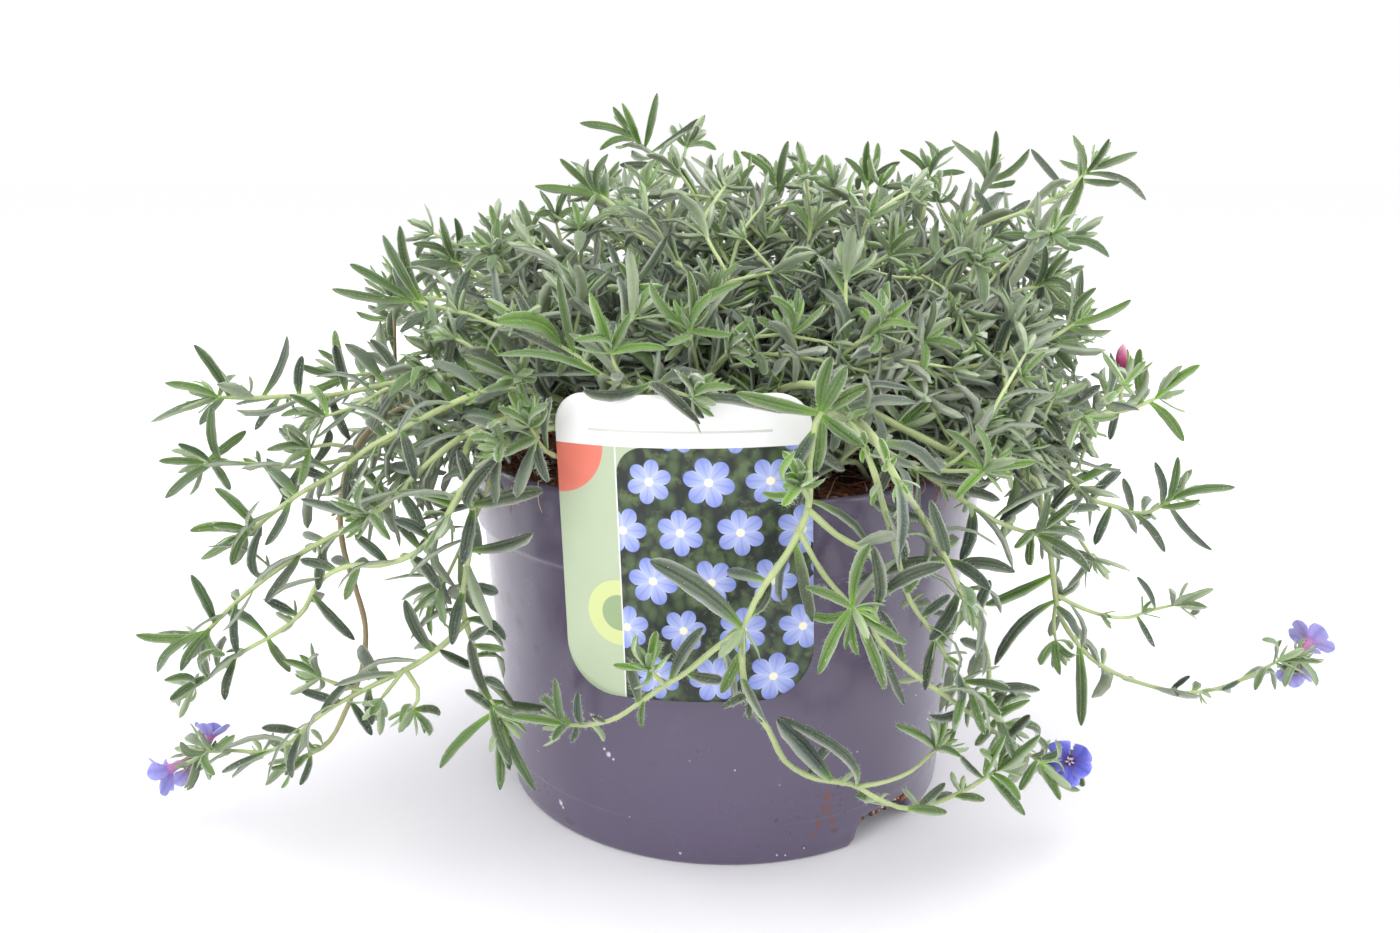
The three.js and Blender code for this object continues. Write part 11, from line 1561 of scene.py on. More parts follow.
 "l": [1000,-229,-655,1337,25,10,59,0,55,23,81,974,-208,-688,1267,27,2,53,0,-22,-5,97,948,-292,-629,1303,28,3,57,0,22,-29,93,922,-189,-651,1367,30,8,33,0,-48,83,29,896,-245,-668,1214,32,4,49,0,-36,-33,87,870,-260,-586,
1380,34,4,35,0,43,-73,53,843,-121,-753,1316,35,6,24,0,-51,12,85,817,-294,-566,1248,37,2,11,0,-24,-36,90,995,-214,-657,1281,20,3,98,0,-2,1,100,995,-226,-630,1312,20,3,91,0,49,-18,86,995,-187,-666,1321,20,3,99,0,-22,61,76,
656,-120,-678,1347,33,8,2,0,-60,45,66]},
{"n": "shoot_back_7", "r": [80, 55], "o": 0, "k": 1, "f": 0, "p": [[926,411,1389],[961,451,1394],[924,535,1416],[904,604,1416]],
 "l": [1000,914,719,1419,25,8,63,0,-23,0,97,980,843,700,1476,27,5,57,0,51,-19,84,960,873,688,1352,30,5,42,0,-14,53,84,941,958,713,1498,32,6,48,0,-71,-16,68,921,772,641,1434,35,5,32,0,28,44,86,901,1007,692,1318,37,10,23,
0,-3,69,73,995,872,664,1407,20,3,77,0,7,18,98,995,916,681,1414,20,3,88,0,-25,6,97,995,880,662,1457,20,3,99,0,38,-42,82,150,1007,488,1534,33,12,0,0,69,51,-51,534,800,592,1386,38,8,1,0,3,28,96,790,970,686,1436,43,6,6,0,
-43,5,90]},
{"n": "shoot_back_4", "r": [70, 55], "o": 0, "k": 1, "f": 0, "p": [[85,748,1185],[110,797,1180],[105,850,1291],[106,899,1350]],
 "l": [1000,144,973,1424,25,3,46,0,-48,-48,74,983,64,930,1426,27,4,58,0,87,-7,50,966,102,1013,1393,28,2,39,0,4,-38,92,949,186,931,1427,30,2,46,0,-74,7,67,932,17,952,1427,32,6,40,0,68,-6,73,916,195,1010,1369,34,7,44,0,
-26,-6,96,899,101,852,1475,35,6,27,0,9,97,22,882,20,1012,1331,37,2,32,0,15,10,98,995,91,971,1387,20,3,76,0,18,-43,89,150,22,912,1104,38,4,0,0,31,55,77,413,178,906,1227,35,13,2,0,-23,-11,97,618,32,806,1380,33,4,9,0,57,57,
60,818,114,1029,1329,42,9,8,0,-1,-5,100]},
{"n": "shoot_left_level", "r": [80, 55], "o": 0, "k": 1, "f": 0, "p": [[-554,-454,1293],[-607,-468,1308],[-650,-480,1359],[-693,-491,1384]],
 "l": [824,-789,-371,1387,37,9,17,0,-19,-32,93,150,-639,-585,1369,42,9,2,0,-32,59,74,594,-738,-372,1405,35,7,5,0,3,-45,89]},
{"n": "shoot_back_2", "r": [70, 55], "o": 0, "k": 1, "f": 0, "p": [[-536,800,1324],[-569,809,1365],[-631,759,1393],[-683,725,1406]],
 "l": [1000,-787,671,1404,25,9,50,0,0,-6,100,978,-763,700,1479,27,5,40,0,68,-14,72,957,-717,608,1432,29,5,58,0,-30,30,90,935,-798,744,1406,31,5,28,0,-2,-34,94,913,-702,666,1514,33,3,32,0,-65,72,24,892,-740,643,1314,35,5,
17,0,-50,-36,79,870,-721,776,1527,37,5,33,0,-15,-96,23,995,-743,709,1434,20,3,96,0,43,-14,89,995,-714,682,1438,20,3,89,0,1,59,81,995,-748,675,1389,20,3,92,0,-18,-9,98,150,-570,693,1440,34,4,0,0,-18,66,73,472,-747,730,
1331,33,5,0,0,-20,-24,95,775,-748,756,1501,40,5,10,0,45,-73,51]},
{"n": "shoot_back_6", "r": [70, 55], "o": 0, "k": 1, "f": 0, "p": [[621,644,1285],[633,680,1307],[582,700,1364],[546,723,1397]],
 "l": [1000,472,738,1449,25,8,65,0,59,11,80,976,560,739,1478,27,7,50,0,-99,3,13,927,407,733,1390,32,10,38,0,2,18,98,903,582,736,1529,35,4,36,0,-97,18,15,879,460,628,1475,37,4,17,0,9,67,74,995,517,759,1460,20,3,94,0,19,
-81,56,150,541,748,1319,41,8,0,0,41,14,90,525,536,838,1401,31,5,1,0,-9,-42,90]},
{"n": "shoot_left_woody", "r": [70, 55], "o": 0, "k": 1, "f": 0, "p": [[-938,-89,1204],[-964,-48,1243],[-949,-85,1370],[-944,-103,1450]],
 "l": [1000,-966,-101,1562,25,4,67,0,88,-45,18,984,-891,-105,1544,27,5,55,0,-87,-13,47,969,-985,-156,1539,28,8,35,0,58,58,57,953,-959,-20,1524,30,8,49,0,13,-71,69,938,-883,-189,1525,32,6,42,0,-40,50,77,906,-823,-63,1532,
35,8,25,0,-57,-28,77,891,-976,-247,1488,37,2,22,0,11,36,92,995,-969,-110,1520,20,3,98,0,95,-1,32,995,-924,-94,1525,20,3,77,0,-73,-63,27,995,-926,-152,1515,20,3,94,0,-30,73,61,434,-957,10,1410,33,12,3,0,2,-90,43,696,-865,
-210,1465,39,13,4,0,-31,40,86]},
{"n": "shoot_top_right_2", "r": [80, 55], "o": 0, "k": 1, "f": 0, "p": [[574,247,1538],[644,265,1577],[762,290,1480],[862,314,1390]],
 "l": [1000,947,352,1361,25,9,63,0,32,0,95,988,904,325,1291,27,8,47,0,88,21,42,976,943,283,1326,29,7,42,0,65,16,75,965,913,420,1356,31,4,45,0,57,0,82,953,881,243,1288,33,6,25,0,93,-13,35,941,973,335,1455,35,3,37,0,-36,
-1,93,930,810,433,1324,37,5,30,0,62,54,57,995,908,318,1323,20,3,89,0,81,17,57,995,928,319,1391,20,3,99,0,0,14,99,995,911,355,1366,20,3,89,0,46,-1,89,357,764,232,1519,37,12,0,0,48,21,85,558,752,389,1395,36,9,8,0,76,38,52,
701,880,197,1400,40,6,9,0,64,16,75,862,920,360,1425,33,10,13,0,13,-20,97]},
{"n": "shoot_back_5", "r": [70, 55], "o": 0, "k": 1, "f": 0, "p": [[416,722,1347],[431,765,1378],[359,829,1410],[310,884,1422]],
 "l": [1000,273,959,1467,25,2,58,0,-1,-52,85,981,224,920,1441,27,2,53,0,29,19,94,962,300,980,1417,28,8,52,0,-30,-1,95,943,256,928,1517,30,8,51,0,82,-8,57,924,198,928,1361,32,5,28,0,-26,36,89,906,343,983,1478,34,8,36,0,
-61,-28,74,887,202,852,1497,35,2,30,0,35,65,67,868,305,986,1291,37,4,12,0,-39,62,68,995,266,935,1418,20,3,99,0,-3,5,100,995,288,932,1435,20,3,95,0,-7,-30,95,995,258,905,1452,20,3,80,0,55,21,81,150,381,816,1459,42,5,2,0,
80,-23,55,429,307,868,1357,31,12,0,0,-15,17,97,762,318,960,1519,32,8,14,0,-45,-65,61]},
{"n": "shoot_back_3", "r": [70, 55], "o": 0, "k": 1, "f": 0, "p": [[-311,773,1172],[-345,756,1224],[-347,749,1308],[-356,740,1363]],
 "l": [1000,-400,732,1449,25,6,62,0,89,1,45,979,-331,729,1458,27,6,47,0,-96,13,25,957,-387,671,1445,28,3,49,0,25,71,65,936,-380,804,1443,30,9,34,0,16,-79,59,914,-360,639,1404,32,8,28,0,-6,47,88,893,-467,703,1408,34,10,
31,0,45,10,89,872,-320,827,1454,35,6,30,0,-35,-70,63,850,-326,604,1408,37,3,24,0,-18,41,90,995,-359,747,1429,20,3,93,0,-17,-98,10,995,-351,708,1428,20,3,85,0,-34,84,43,995,-396,729,1415,20,3,83,0,78,14,61,150,-401,884,
1296,39,4,0,0,0,-66,76,526,-301,636,1370,33,4,7,0,-23,57,79]},
{"n": "shoot_back_7", "r": [70, 55], "o": 0, "k": 1, "f": 0, "p": [[917,305,1364],[960,267,1379],[956,211,1453],[962,161,1491]],
 "l": [1000,957,109,1572,25,7,58,0,45,74,51,980,1027,81,1541,27,5,63,0,-47,18,87,959,902,58,1540,30,3,47,0,43,20,88,939,995,156,1610,32,4,39,0,-59,-80,7,919,1015,26,1450,35,6,21,0,0,-22,98,898,832,122,1586,37,6,31,0,67,
-22,70,995,950,105,1529,20,3,93,0,31,49,82,995,999,98,1518,20,3,80,0,-32,20,92,150,959,122,1396,42,3,4,0,39,18,90,488,1062,230,1544,41,4,0,0,-77,-29,56,759,929,66,1489,36,4,14,0,15,14,98]},
{"n": "shoot_back_7", "r": [80, 55], "o": 0, "k": 1, "f": 0, "p": [[861,388,1382],[896,410,1409],[878,439,1491],[872,465,1541]],
 "l": [1000,896,510,1631,25,10,53,0,-69,-55,46,978,800,502,1613,27,6,45,0,70,-9,71,956,816,530,1571,28,4,40,0,33,-21,92,933,808,407,1616,30,8,43,0,39,61,69,911,808,393,1608,32,5,27,0,31,59,75,867,941,386,1633,35,9,20,0,
-41,64,65,845,796,596,1538,37,3,18,0,11,-6,99,995,872,510,1591,20,3,95,0,-6,-74,67,995,840,481,1593,20,3,86,0,85,-6,53,150,946,534,1350,35,11,0,0,34,11,93,576,865,517,1550,30,10,1,0,2,-68,73]},
{"n": "shoot_back_4", "r": [70, 55], "o": 0, "k": 1, "f": 0, "p": [[105,883,1332],[116,905,1388],[151,873,1465],[178,854,1515]],
 "l": [1000,206,796,1603,25,5,54,0,-8,82,57,979,218,883,1606,27,6,60,0,-36,-84,40,959,260,804,1567,28,3,55,0,-43,26,87,938,148,835,1613,30,7,41,0,96,15,25,918,264,903,1589,32,4,33,0,-43,-52,74,897,219,717,1560,34,2,29,0,
4,40,92,876,120,889,1633,35,8,26,0,79,-48,39,856,344,852,1510,37,3,29,0,-9,-11,99,995,194,851,1573,20,3,78,0,65,-73,-22,995,224,834,1555,20,3,92,0,-59,20,78,995,183,807,1584,20,3,88,0,30,80,53,150,17,931,1498,38,9,4,0,
84,5,54,462,190,749,1445,41,6,3,0,2,19,98,717,107,892,1629,35,5,5,0,82,-48,33]},
{"n": "shoot_back_9", "r": [70, 55], "o": 0, "k": 1, "f": 0, "p": [[-306,554,1537],[-355,569,1555],[-412,602,1521],[-465,628,1484]],
 "l": [1000,-545,694,1465,25,10,58,0,-25,-3,97,978,-568,614,1434,27,6,57,0,-45,31,84,956,-496,717,1401,29,4,50,0,-63,38,67,934,-563,610,1523,31,6,28,0,17,55,82,912,-512,576,1353,33,7,35,0,-92,16,35,890,-477,758,1499,35,
9,40,0,-56,-13,82,868,-566,517,1507,37,4,18,0,-37,51,77,995,-520,646,1467,20,3,99,0,-23,17,96,995,-511,629,1439,20,3,94,0,-66,29,69,995,-495,685,1450,20,3,95,0,-54,19,82,150,-445,597,1492,39,9,0,0,-42,5,90,583,-449,730,
1575,40,10,5,0,-46,-42,78]},
{"n": "shoot_right_fan", "r": [80, 55], "o": 0, "k": 1, "f": 0, "p": [[592,-245,1433],[641,-259,1463],[622,-362,1530],[619,-439,1565]],
 "l": [1000,596,-548,1590,25,5,62,0,15,19,97,984,610,-504,1662,27,3,43,0,43,72,54,968,674,-537,1572,30,5,43,0,-25,-4,97,952,515,-525,1584,32,7,35,0,36,-16,92,919,616,-544,1471,37,7,24,0,-1,-57,82,995,607,-486,1610,20,3,
93,0,41,57,71,995,647,-505,1578,20,3,86,0,-26,8,96,995,600,-521,1568,20,3,96,0,11,2,99]},
{"n": "shoot_back_9", "r": [80, 55], "o": 0, "k": 1, "f": 0, "p": [[-200,542,1444],[-192,586,1470],[-126,637,1451],[-76,684,1427]],
 "l": [1000,-29,774,1420,25,5,61,0,24,-5,97,979,-5,724,1351,27,9,53,0,49,46,74,958,15,736,1472,30,9,32,0,-43,6,90,938,-95,804,1367,32,3,41,0,45,43,78,917,46,636,1385,35,3,42,0,40,46,79,896,-63,799,1541,37,9,25,0,69,-55,
48,995,-9,715,1398,20,3,99,0,23,34,91,995,-36,726,1438,20,3,96,0,-10,-15,98,995,-63,708,1379,20,3,84,0,58,64,50,150,-166,550,1617,39,5,0,0,-37,92,14,566,-106,654,1321,35,5,6,0,76,55,35]},
{"n": "shoot_left_low_1", "r": [70, 55], "o": 0, "k": 1, "f": 0, "p": [[-393,-502,1292],[-397,-525,1349],[-380,-509,1427],[-369,-503,1480]],
 "l": [1000,-317,-504,1556,25,6,50,0,-82,9,56,978,-395,-548,1581,27,6,47,0,53,72,44,933,-298,-532,1553,30,7,55,0,-64,35,68,911,-434,-492,1577,32,2,43,0,86,-8,50,889,-272,-429,1543,34,10,39,0,-41,-35,84,867,-372,-623,
1575,35,3,25,0,11,70,71,844,-438,-382,1552,37,4,17,0,36,-44,82,995,-365,-514,1543,20,3,96,0,10,98,16,995,-320,-495,1543,20,3,79,0,-78,-10,62,150,-308,-503,1422,36,4,0,0,-71,-34,62,537,-444,-481,1514,41,3,4,0,84,-24,49]},
{"n": "shoot_top_right_2", "r": [70, 55], "o": 0, "k": 1, "f": 0, "p": [[699,276,1519],[748,286,1523],[805,291,1578],[856,296,1601]],
 "l": [976,922,274,1677,27,8,53,0,-47,65,60,953,919,373,1559,30,3,32,0,44,4,89,929,969,216,1598,32,5,38,0,15,26,95,906,875,327,1731,35,8,36,0,80,-60,-5,882,950,374,1511,37,9,14,0,54,11,83,995,900,304,1647,20,3,76,0,-67,
-26,69,995,905,324,1616,20,3,97,0,-10,-33,94,150,731,290,1376,33,11,0,0,97,22,7,564,823,216,1718,35,9,6,0,24,90,36]},
{"n": "shoot_back_6", "r": [80, 55], "o": 0, "k": 1, "f": 0, "p": [[464,459,1211],[490,532,1279],[377,591,1407],[302,650,1483]],
 "l": [1000,275,694,1557,25,3,67,0,2,-86,52,989,209,665,1525,27,5,54,0,44,15,88,978,268,755,1517,30,2,37,0,-11,-37,92,968,281,638,1617,32,7,34,0,-32,95,-2,957,166,684,1457,35,7,30,0,-6,17,98,946,369,750,1560,37,5,33,0,
-63,-27,73,995,254,666,1547,20,3,94,0,81,11,58,995,241,691,1509,20,3,78,0,30,-16,94,995,291,701,1536,20,3,94,0,-29,-72,63,150,466,595,1264,43,7,0,0,31,-17,94,305,523,495,1413,38,12,3,0,-51,81,29,504,322,529,1394,34,12,8,
0,28,34,90,641,328,721,1459,41,4,2,0,-8,-44,90,768,304,650,1562,41,4,10,0,-75,50,-44]},
{"n": "shoot_back_9", "r": [70, 55], "o": 0, "k": 1, "f": 0, "p": [[-251,552,1497],[-288,582,1537],[-306,651,1568],[-327,708,1583]],
 "l": [1000,-340,783,1636,25,4,70,0,-13,-58,80,978,-377,777,1566,27,8,61,0,0,22,98,957,-283,797,1606,30,7,51,0,-47,-3,88,935,-378,748,1694,32,5,39,0,88,42,23,913,-403,779,1503,35,7,22,0,-23,51,83,892,-393,659,1693,37,4,
31,0,26,88,40,995,-330,769,1610,20,3,97,0,-23,-40,89,995,-370,757,1626,20,3,91,0,59,-17,79,995,-354,776,1562,20,3,95,0,-10,25,96,150,-245,692,1605,42,7,5,0,-48,-44,76,567,-430,673,1675,42,5,0,0,68,39,62]},
{"n": "shoot_top_right_2", "r": [70, 55], "o": 0, "k": 1, "f": 0, "p": [[623,258,1530],[668,297,1577],[648,378,1584],[642,444,1573]],
 "l": [1000,619,551,1600,25,9,59,0,18,-20,96,978,617,546,1510,27,10,57,0,-2,51,86,957,699,538,1591,28,5,52,0,-42,9,90,936,559,514,1615,30,8,35,0,57,21,79,914,694,511,1494,32,6,27,0,1,70,72,893,652,538,1685,34,4,29,0,-48,
-59,66,871,540,478,1498,35,7,28,0,-16,68,72,850,793,501,1576,37,2,33,0,-27,49,83,995,641,521,1592,20,3,91,0,-4,-24,97,995,606,512,1556,20,3,96,0,13,30,94,995,669,510,1545,20,3,94,0,-12,43,90,150,725,311,1434,34,9,0,0,73,
47,50,458,617,412,1693,36,3,7,0,79,-27,54,775,588,491,1482,35,4,13,0,-12,70,71]},
{"n": "shoot_left_low_1", "r": [70, 55], "o": 0, "k": 1, "f": 0, "p": [[-372,-505,1464],[-381,-487,1527],[-450,-443,1578],[-502,-406,1609]],
 "l": [888,-581,-300,1512,37,3,24,0,-40,31,86,150,-279,-390,1558,42,6,1,0,-33,-26,91,406,-530,-511,1608,39,12,5,0,32,42,85,669,-505,-308,1569,36,10,11,0,-24,-4,97]},
{"n": "shoot_back_6", "r": [70, 55], "o": 0, "k": 1, "f": 0, "p": [[326,634,1458],[317,657,1507],[400,663,1574],[458,672,1615]],
 "l": [1000,531,723,1694,25,8,64,0,-34,-62,71,981,556,663,1644,27,8,56,0,-28,15,95,963,493,670,1725,29,2,58,0,91,27,-33,944,545,756,1633,31,5,46,0,1,-29,96,926,425,641,1729,33,8,45,0,86,44,24,907,553,720,1593,35,7,31,0,
12,-5,99,888,584,692,1540,37,8,17,0,38,7,92,995,494,668,1662,20,3,91,0,-70,42,58,995,507,713,1667,20,3,98,0,-25,-63,74,995,534,670,1632,20,3,94,0,-22,10,97,477,377,786,1647,37,4,8,0,31,-67,67,752,586,650,1580,36,6,12,0,
4,9,100]},
{"n": "shoot_right_fan", "r": [80, 55], "o": 0, "k": 1, "f": 0, "p": [[530,-251,1403],[572,-255,1447],[594,-257,1521],[620,-257,1566]],
 "l": [1000,698,-252,1641,25,2,53,0,-68,-8,72,977,645,-297,1675,27,9,63,0,3,94,33,954,616,-242,1666,28,3,42,0,84,-54,7,931,723,-254,1610,30,6,53,0,-43,-3,90,908,589,-202,1661,32,7,32,0,64,-61,47,884,733,-235,1554,34,6,
40,0,-1,-5,100,861,641,-374,1633,35,8,16,0,11,60,79,838,575,-157,1661,37,7,33,0,48,-59,65,995,642,-280,1633,20,3,99,0,-22,90,38,995,647,-231,1633,20,3,79,0,-28,-84,45,995,688,-268,1613,20,3,78,0,-55,13,82,150,599,-162,
1496,41,6,0,0,14,-65,75,490,632,-168,1575,39,11,0,0,-22,-66,72]},
{"n": "shoot_front_star_3", "r": [80, 55], "o": 0, "k": 1, "f": 0, "p": [[257,-580,1334],[278,-590,1402],[278,-544,1489],[283,-513,1547]],
 "l": [1000,319,-469,1625,25,6,54,0,-67,-48,57,981,265,-517,1662,27,7,45,0,65,75,11,963,281,-401,1618,29,2,54,0,6,-55,83,944,357,-454,1599,31,10,41,0,-50,-22,84,907,377,-406,1576,35,4,19,0,-26,-15,95,889,282,-606,1665,
37,3,22,0,5,85,52,995,272,-497,1610,20,3,91,0,93,-30,23,995,285,-456,1600,20,3,100,0,2,-68,73,995,322,-498,1617,20,3,86,0,-88,5,47,150,218,-505,1511,32,11,0,0,52,-66,55,690,218,-396,1560,35,6,10,0,24,-32,92]},
{"n": "shoot_top_fan", "r": [80, 55], "o": 0, "k": 1, "f": 0, "p": [[-45,-360,1350],[-39,-392,1401],[-44,-421,1458],[-48,-446,1496]],
 "l": [1000,-84,-483,1587,25,6,48,0,85,28,45,974,20,-491,1568,27,9,60,0,-70,11,70,947,-99,-560,1553,30,4,36,0,25,36,90,894,-24,-562,1494,35,9,27,0,-9,6,99,868,-202,-486,1546,37,3,17,0,41,-13,90,995,-34,-487,1549,20,3,77,
0,-45,65,61,995,-77,-497,1547,20,3,96,0,46,49,74,995,-40,-457,1562,20,3,79,0,-89,-46,2,150,38,-532,1414,37,10,0,0,-18,17,97,514,-109,-528,1497,43,3,8,0,27,33,90]},
{"n": "shoot_right_fan", "r": [70, 55], "o": 0, "k": 1, "f": 0, "p": [[565,-255,1438],[576,-270,1480],[517,-328,1517],[477,-373,1537]],
 "l": [891,529,-473,1611,35,10,26,0,-67,25,70]},
{"n": "shoot_top_fan", "r": [70, 55], "o": 0, "k": 1, "f": 0, "p": [[-45,-428,1464],[-25,-444,1508],[58,-429,1532],[122,-422,1543]],
 "l": [1000,213,-437,1593,25,7,46,0,-41,33,85,979,205,-368,1568,27,2,42,0,-3,-38,93,957,232,-463,1530,28,7,51,0,17,19,97,914,213,-354,1492,32,7,35,0,42,-1,91,893,206,-532,1597,34,2,40,0,15,57,81,850,202,-461,1420,37,8,
35,0,74,-2,68,995,192,-403,1543,20,3,96,0,2,-9,100,995,181,-442,1559,20,3,88,0,-13,34,93,995,170,-385,1578,20,3,80,0,-9,-62,78,572,113,-319,1535,32,7,4,0,27,-26,93]},
{"n": "shoot_back_9", "r": [80, 55], "o": 0, "k": 1, "f": 0, "p": [[-151,400,1250],[-168,455,1358],[-182,496,1491],[-196,538,1580]],
 "l": [1000,-209,548,1678,25,5,56,0,66,75,1,988,-266,567,1646,27,4,50,0,69,-6,72,964,-302,523,1628,31,7,46,0,44,26,86,951,-218,670,1619,33,4,42,0,3,-34,94,939,-120,503,1695,35,9,23,0,-69,52,50,927,-344,551,1626,37,5,34,
0,41,14,90,995,-198,586,1631,20,3,97,0,-5,-74,68,995,-196,542,1652,20,3,89,0,-40,92,-6,150,-84,443,1439,37,8,0,0,-88,20,44,391,-195,369,1523,31,11,7,0,10,82,56,594,-241,599,1521,38,8,5,0,22,-34,92,733,-117,507,1636,42,7,
15,0,-85,28,46]},
{"n": "shoot_centre_right", "r": [80, 55], "o": 0, "k": 1, "f": 0, "p": [[311,-213,1524],[361,-225,1550],[349,-310,1632],[351,-373,1677]],
 "l": [983,415,-458,1745,27,4,51,0,-56,23,80,966,298,-478,1704,30,8,52,0,30,13,95,995,331,-431,1726,20,3,91,0,45,49,75,150,461,-286,1453,32,13,0,0,51,-6,86,474,340,-260,1717,41,10,3,0,26,-97,1]},
{"n": "shoot_top_left_2", "r": [80, 55], "o": 0, "k": 1, "f": 0, "p": [[-369,-159,1492],[-404,-155,1522],[-397,-205,1598],[-400,-241,1644]],
 "l": [910,-272,-271,1691,35,5,40,0,-46,-16,87,888,-390,-376,1588,37,9,19,0,-3,-27,96,150,-363,-87,1609,42,12,0,0,-79,-41,45,546,-293,-257,1646,41,7,2,0,-53,9,84]},
{"n": "shoot_back_9", "r": [70, 55], "o": 0, "k": 1, "f": 0, "p": [[-384,550,1589],[-415,530,1623],[-394,485,1688],[-385,448,1728]],
 "l": [1000,-390,401,1828,25,8,55,0,65,68,35,977,-322,375,1799,27,2,61,0,-55,29,78,954,-429,351,1795,28,4,56,0,44,39,81,930,-336,447,1823,30,4,44,0,-77,-54,34,907,-340,339,1735,32,3,44,0,-11,10,99,884,-486,401,1822,34,4,
22,0,74,-4,67,860,-293,365,1666,35,10,38,0,10,-34,93,837,-442,330,1699,37,5,22,0,13,-13,98,995,-402,410,1784,20,3,77,0,69,49,53,150,-492,427,1598,33,7,0,0,-15,8,99,502,-482,458,1750,32,11,0,0,76,6,65]},
{"n": "shoot_top_right", "r": [80, 55], "o": 0, "k": 1, "f": 0, "p": [[440,274,1692],[439,326,1728],[422,409,1725],[409,479,1714]],
 "l": [1000,431,594,1712,25,7,48,0,-24,6,97,980,355,562,1741,27,5,38,0,41,-2,91,960,409,568,1629,30,8,49,0,-10,66,75,940,448,590,1803,32,5,46,0,-69,-27,68,920,266,529,1686,35,9,34,0,6,52,85,900,537,545,1653,37,3,12,0,-4,
63,77,995,416,556,1692,20,3,81,0,-13,28,95,995,405,550,1740,20,3,86,0,-9,-35,93,995,370,526,1703,20,3,99,0,14,33,93,150,457,471,1697,31,9,3,0,-1,7,100,721,275,486,1700,41,4,10,0,9,50,86]},
{"n": "shoot_centre_right", "r": [70, 55], "o": 0, "k": 1, "f": 0, "p": [[349,-310,1632],[364,-328,1671],[430,-270,1714],[482,-231,1738]],
 "l": [919,507,-90,1727,33,4,23,0,31,-4,95]},
{"n": "shoot_back_9", "r": [70, 55], "o": 0, "k": 1, "f": 0, "p": [[-191,524,1552],[-178,556,1615],[-101,582,1672],[-42,608,1707]],
 "l": [1000,42,612,1752,25,6,49,0,-47,20,86,982,-47,648,1784,27,6,53,0,82,-50,28,964,69,669,1704,29,9,55,0,1,-3,100,946,33,568,1815,31,9,48,0,-29,82,48,928,-27,723,1759,33,6,46,0,32,-48,82,910,94,566,1676,35,9,32,0,19,
22,96,892,-40,528,1845,37,4,29,0,45,83,33,995,-5,644,1751,20,3,80,0,-23,-64,73,995,25,636,1720,20,3,96,0,-17,-6,98,150,-140,682,1643,31,8,0,0,-15,-35,92,426,-124,514,1761,35,10,4,0,22,93,30,649,-59,704,1741,34,4,1,0,22,
-55,81]},
{"n": "shoot_top_fan", "r": [80, 55], "o": 0, "k": 1, "f": 0, "p": [[-127,-317,1540],[-156,-306,1584],[-187,-335,1646],[-216,-352,1684]],
 "l": [1000,-298,-356,1722,25,4,58,0,43,-15,89,951,-326,-371,1690,30,2,37,0,12,-8,99,901,-256,-486,1706,35,5,37,0,-14,27,95,995,-273,-387,1729,20,3,84,0,47,31,83,995,-264,-357,1729,20,3,86,0,69,-16,70,150,-235,-375,1664,
42,8,6,0,25,70,67,490,-288,-334,1675,34,9,3,0,48,-13,87]},
{"n": "shoot_top_left", "r": [80, 55], "o": 0, "k": 1, "f": 0, "p": [[-161,85,1618],[-201,119,1680],[-319,185,1663],[-413,240,1639]],
 "l": [1000,-473,306,1609,25,5,61,0,-35,10,93,987,-498,288,1659,27,5,53,0,17,-7,98,974,-515,228,1571,30,4,53,0,-53,31,79,960,-437,312,1559,32,9,37,0,-59,44,67,934,-407,303,1487,37,8,16,0,-67,65,36,995,-487,267,1652,20,3,
84,0,20,8,98,995,-464,256,1610,20,3,99,0,-40,27,87,995,-449,307,1635,20,3,86,0,-33,-13,94,150,-330,122,1703,33,12,0,0,33,10,94,416,-277,283,1697,41,4,0,0,-38,-23,90,632,-449,134,1728,39,6,10,0,12,66,74,798,-441,294,1543,
39,11,8,0,-58,37,73]},
{"n": "shoot_back_10", "r": [80, 55], "o": 0, "k": 1, "f": 0, "p": [[226,406,1284],[237,449,1386],[214,468,1516],[199,492,1604]],
 "l": [1000,162,537,1692,25,6,57,0,56,-62,56,987,254,520,1679,27,6,53,0,-77,-20,60,974,140,440,1685,29,6,36,0,45,61,66,961,176,587,1656,31,7,51,0,9,-52,85,948,272,428,1649,33,10,27,0,-37,38,85,935,60,533,1665,35,8,22,0,
47,-5,88,922,309,577,1668,37,8,11,0,-48,-21,85,995,191,540,1670,20,3,95,0,4,-81,59,995,219,489,1682,20,3,91,0,-89,40,23,150,182,508,1400,36,5,0,0,47,-40,79,344,207,593,1452,32,12,0,0,7,-39,92,582,306,408,1625,39,4,8,0,
-68,43,59,764,67,499,1644,34,10,9,0,58,1,82]},
{"n": "shoot_top_fan", "r": [70, 55], "o": 0, "k": 1, "f": 0, "p": [[-18,-431,1488],[-13,-436,1543],[-45,-393,1599],[-64,-359,1635]],
 "l": [901,-185,-290,1659,32,6,30,0,28,4,96,851,-135,-410,1737,35,5,27,0,42,75,51,995,-98,-311,1656,20,3,77,0,23,-26,94]},
{"n": "shoot_top_right", "r": [80, 55], "o": 0, "k": 1, "f": 0, "p": [[427,210,1582],[439,208,1647],[440,118,1711],[444,52,1751]],
 "l": [949,527,-24,1741,31,8,33,0,-17,-21,96,897,416,-85,1666,37,4,18,0,2,-43,90,150,419,84,1729,31,13,0,0,17,65,74,440,359,53,1685,39,13,0,0,23,-2,97]},
{"n": "shoot_back_9", "r": [70, 55], "o": 0, "k": 1, "f": 0, "p": [[-178,486,1448],[-192,477,1535],[-219,382,1618],[-242,312,1671]],
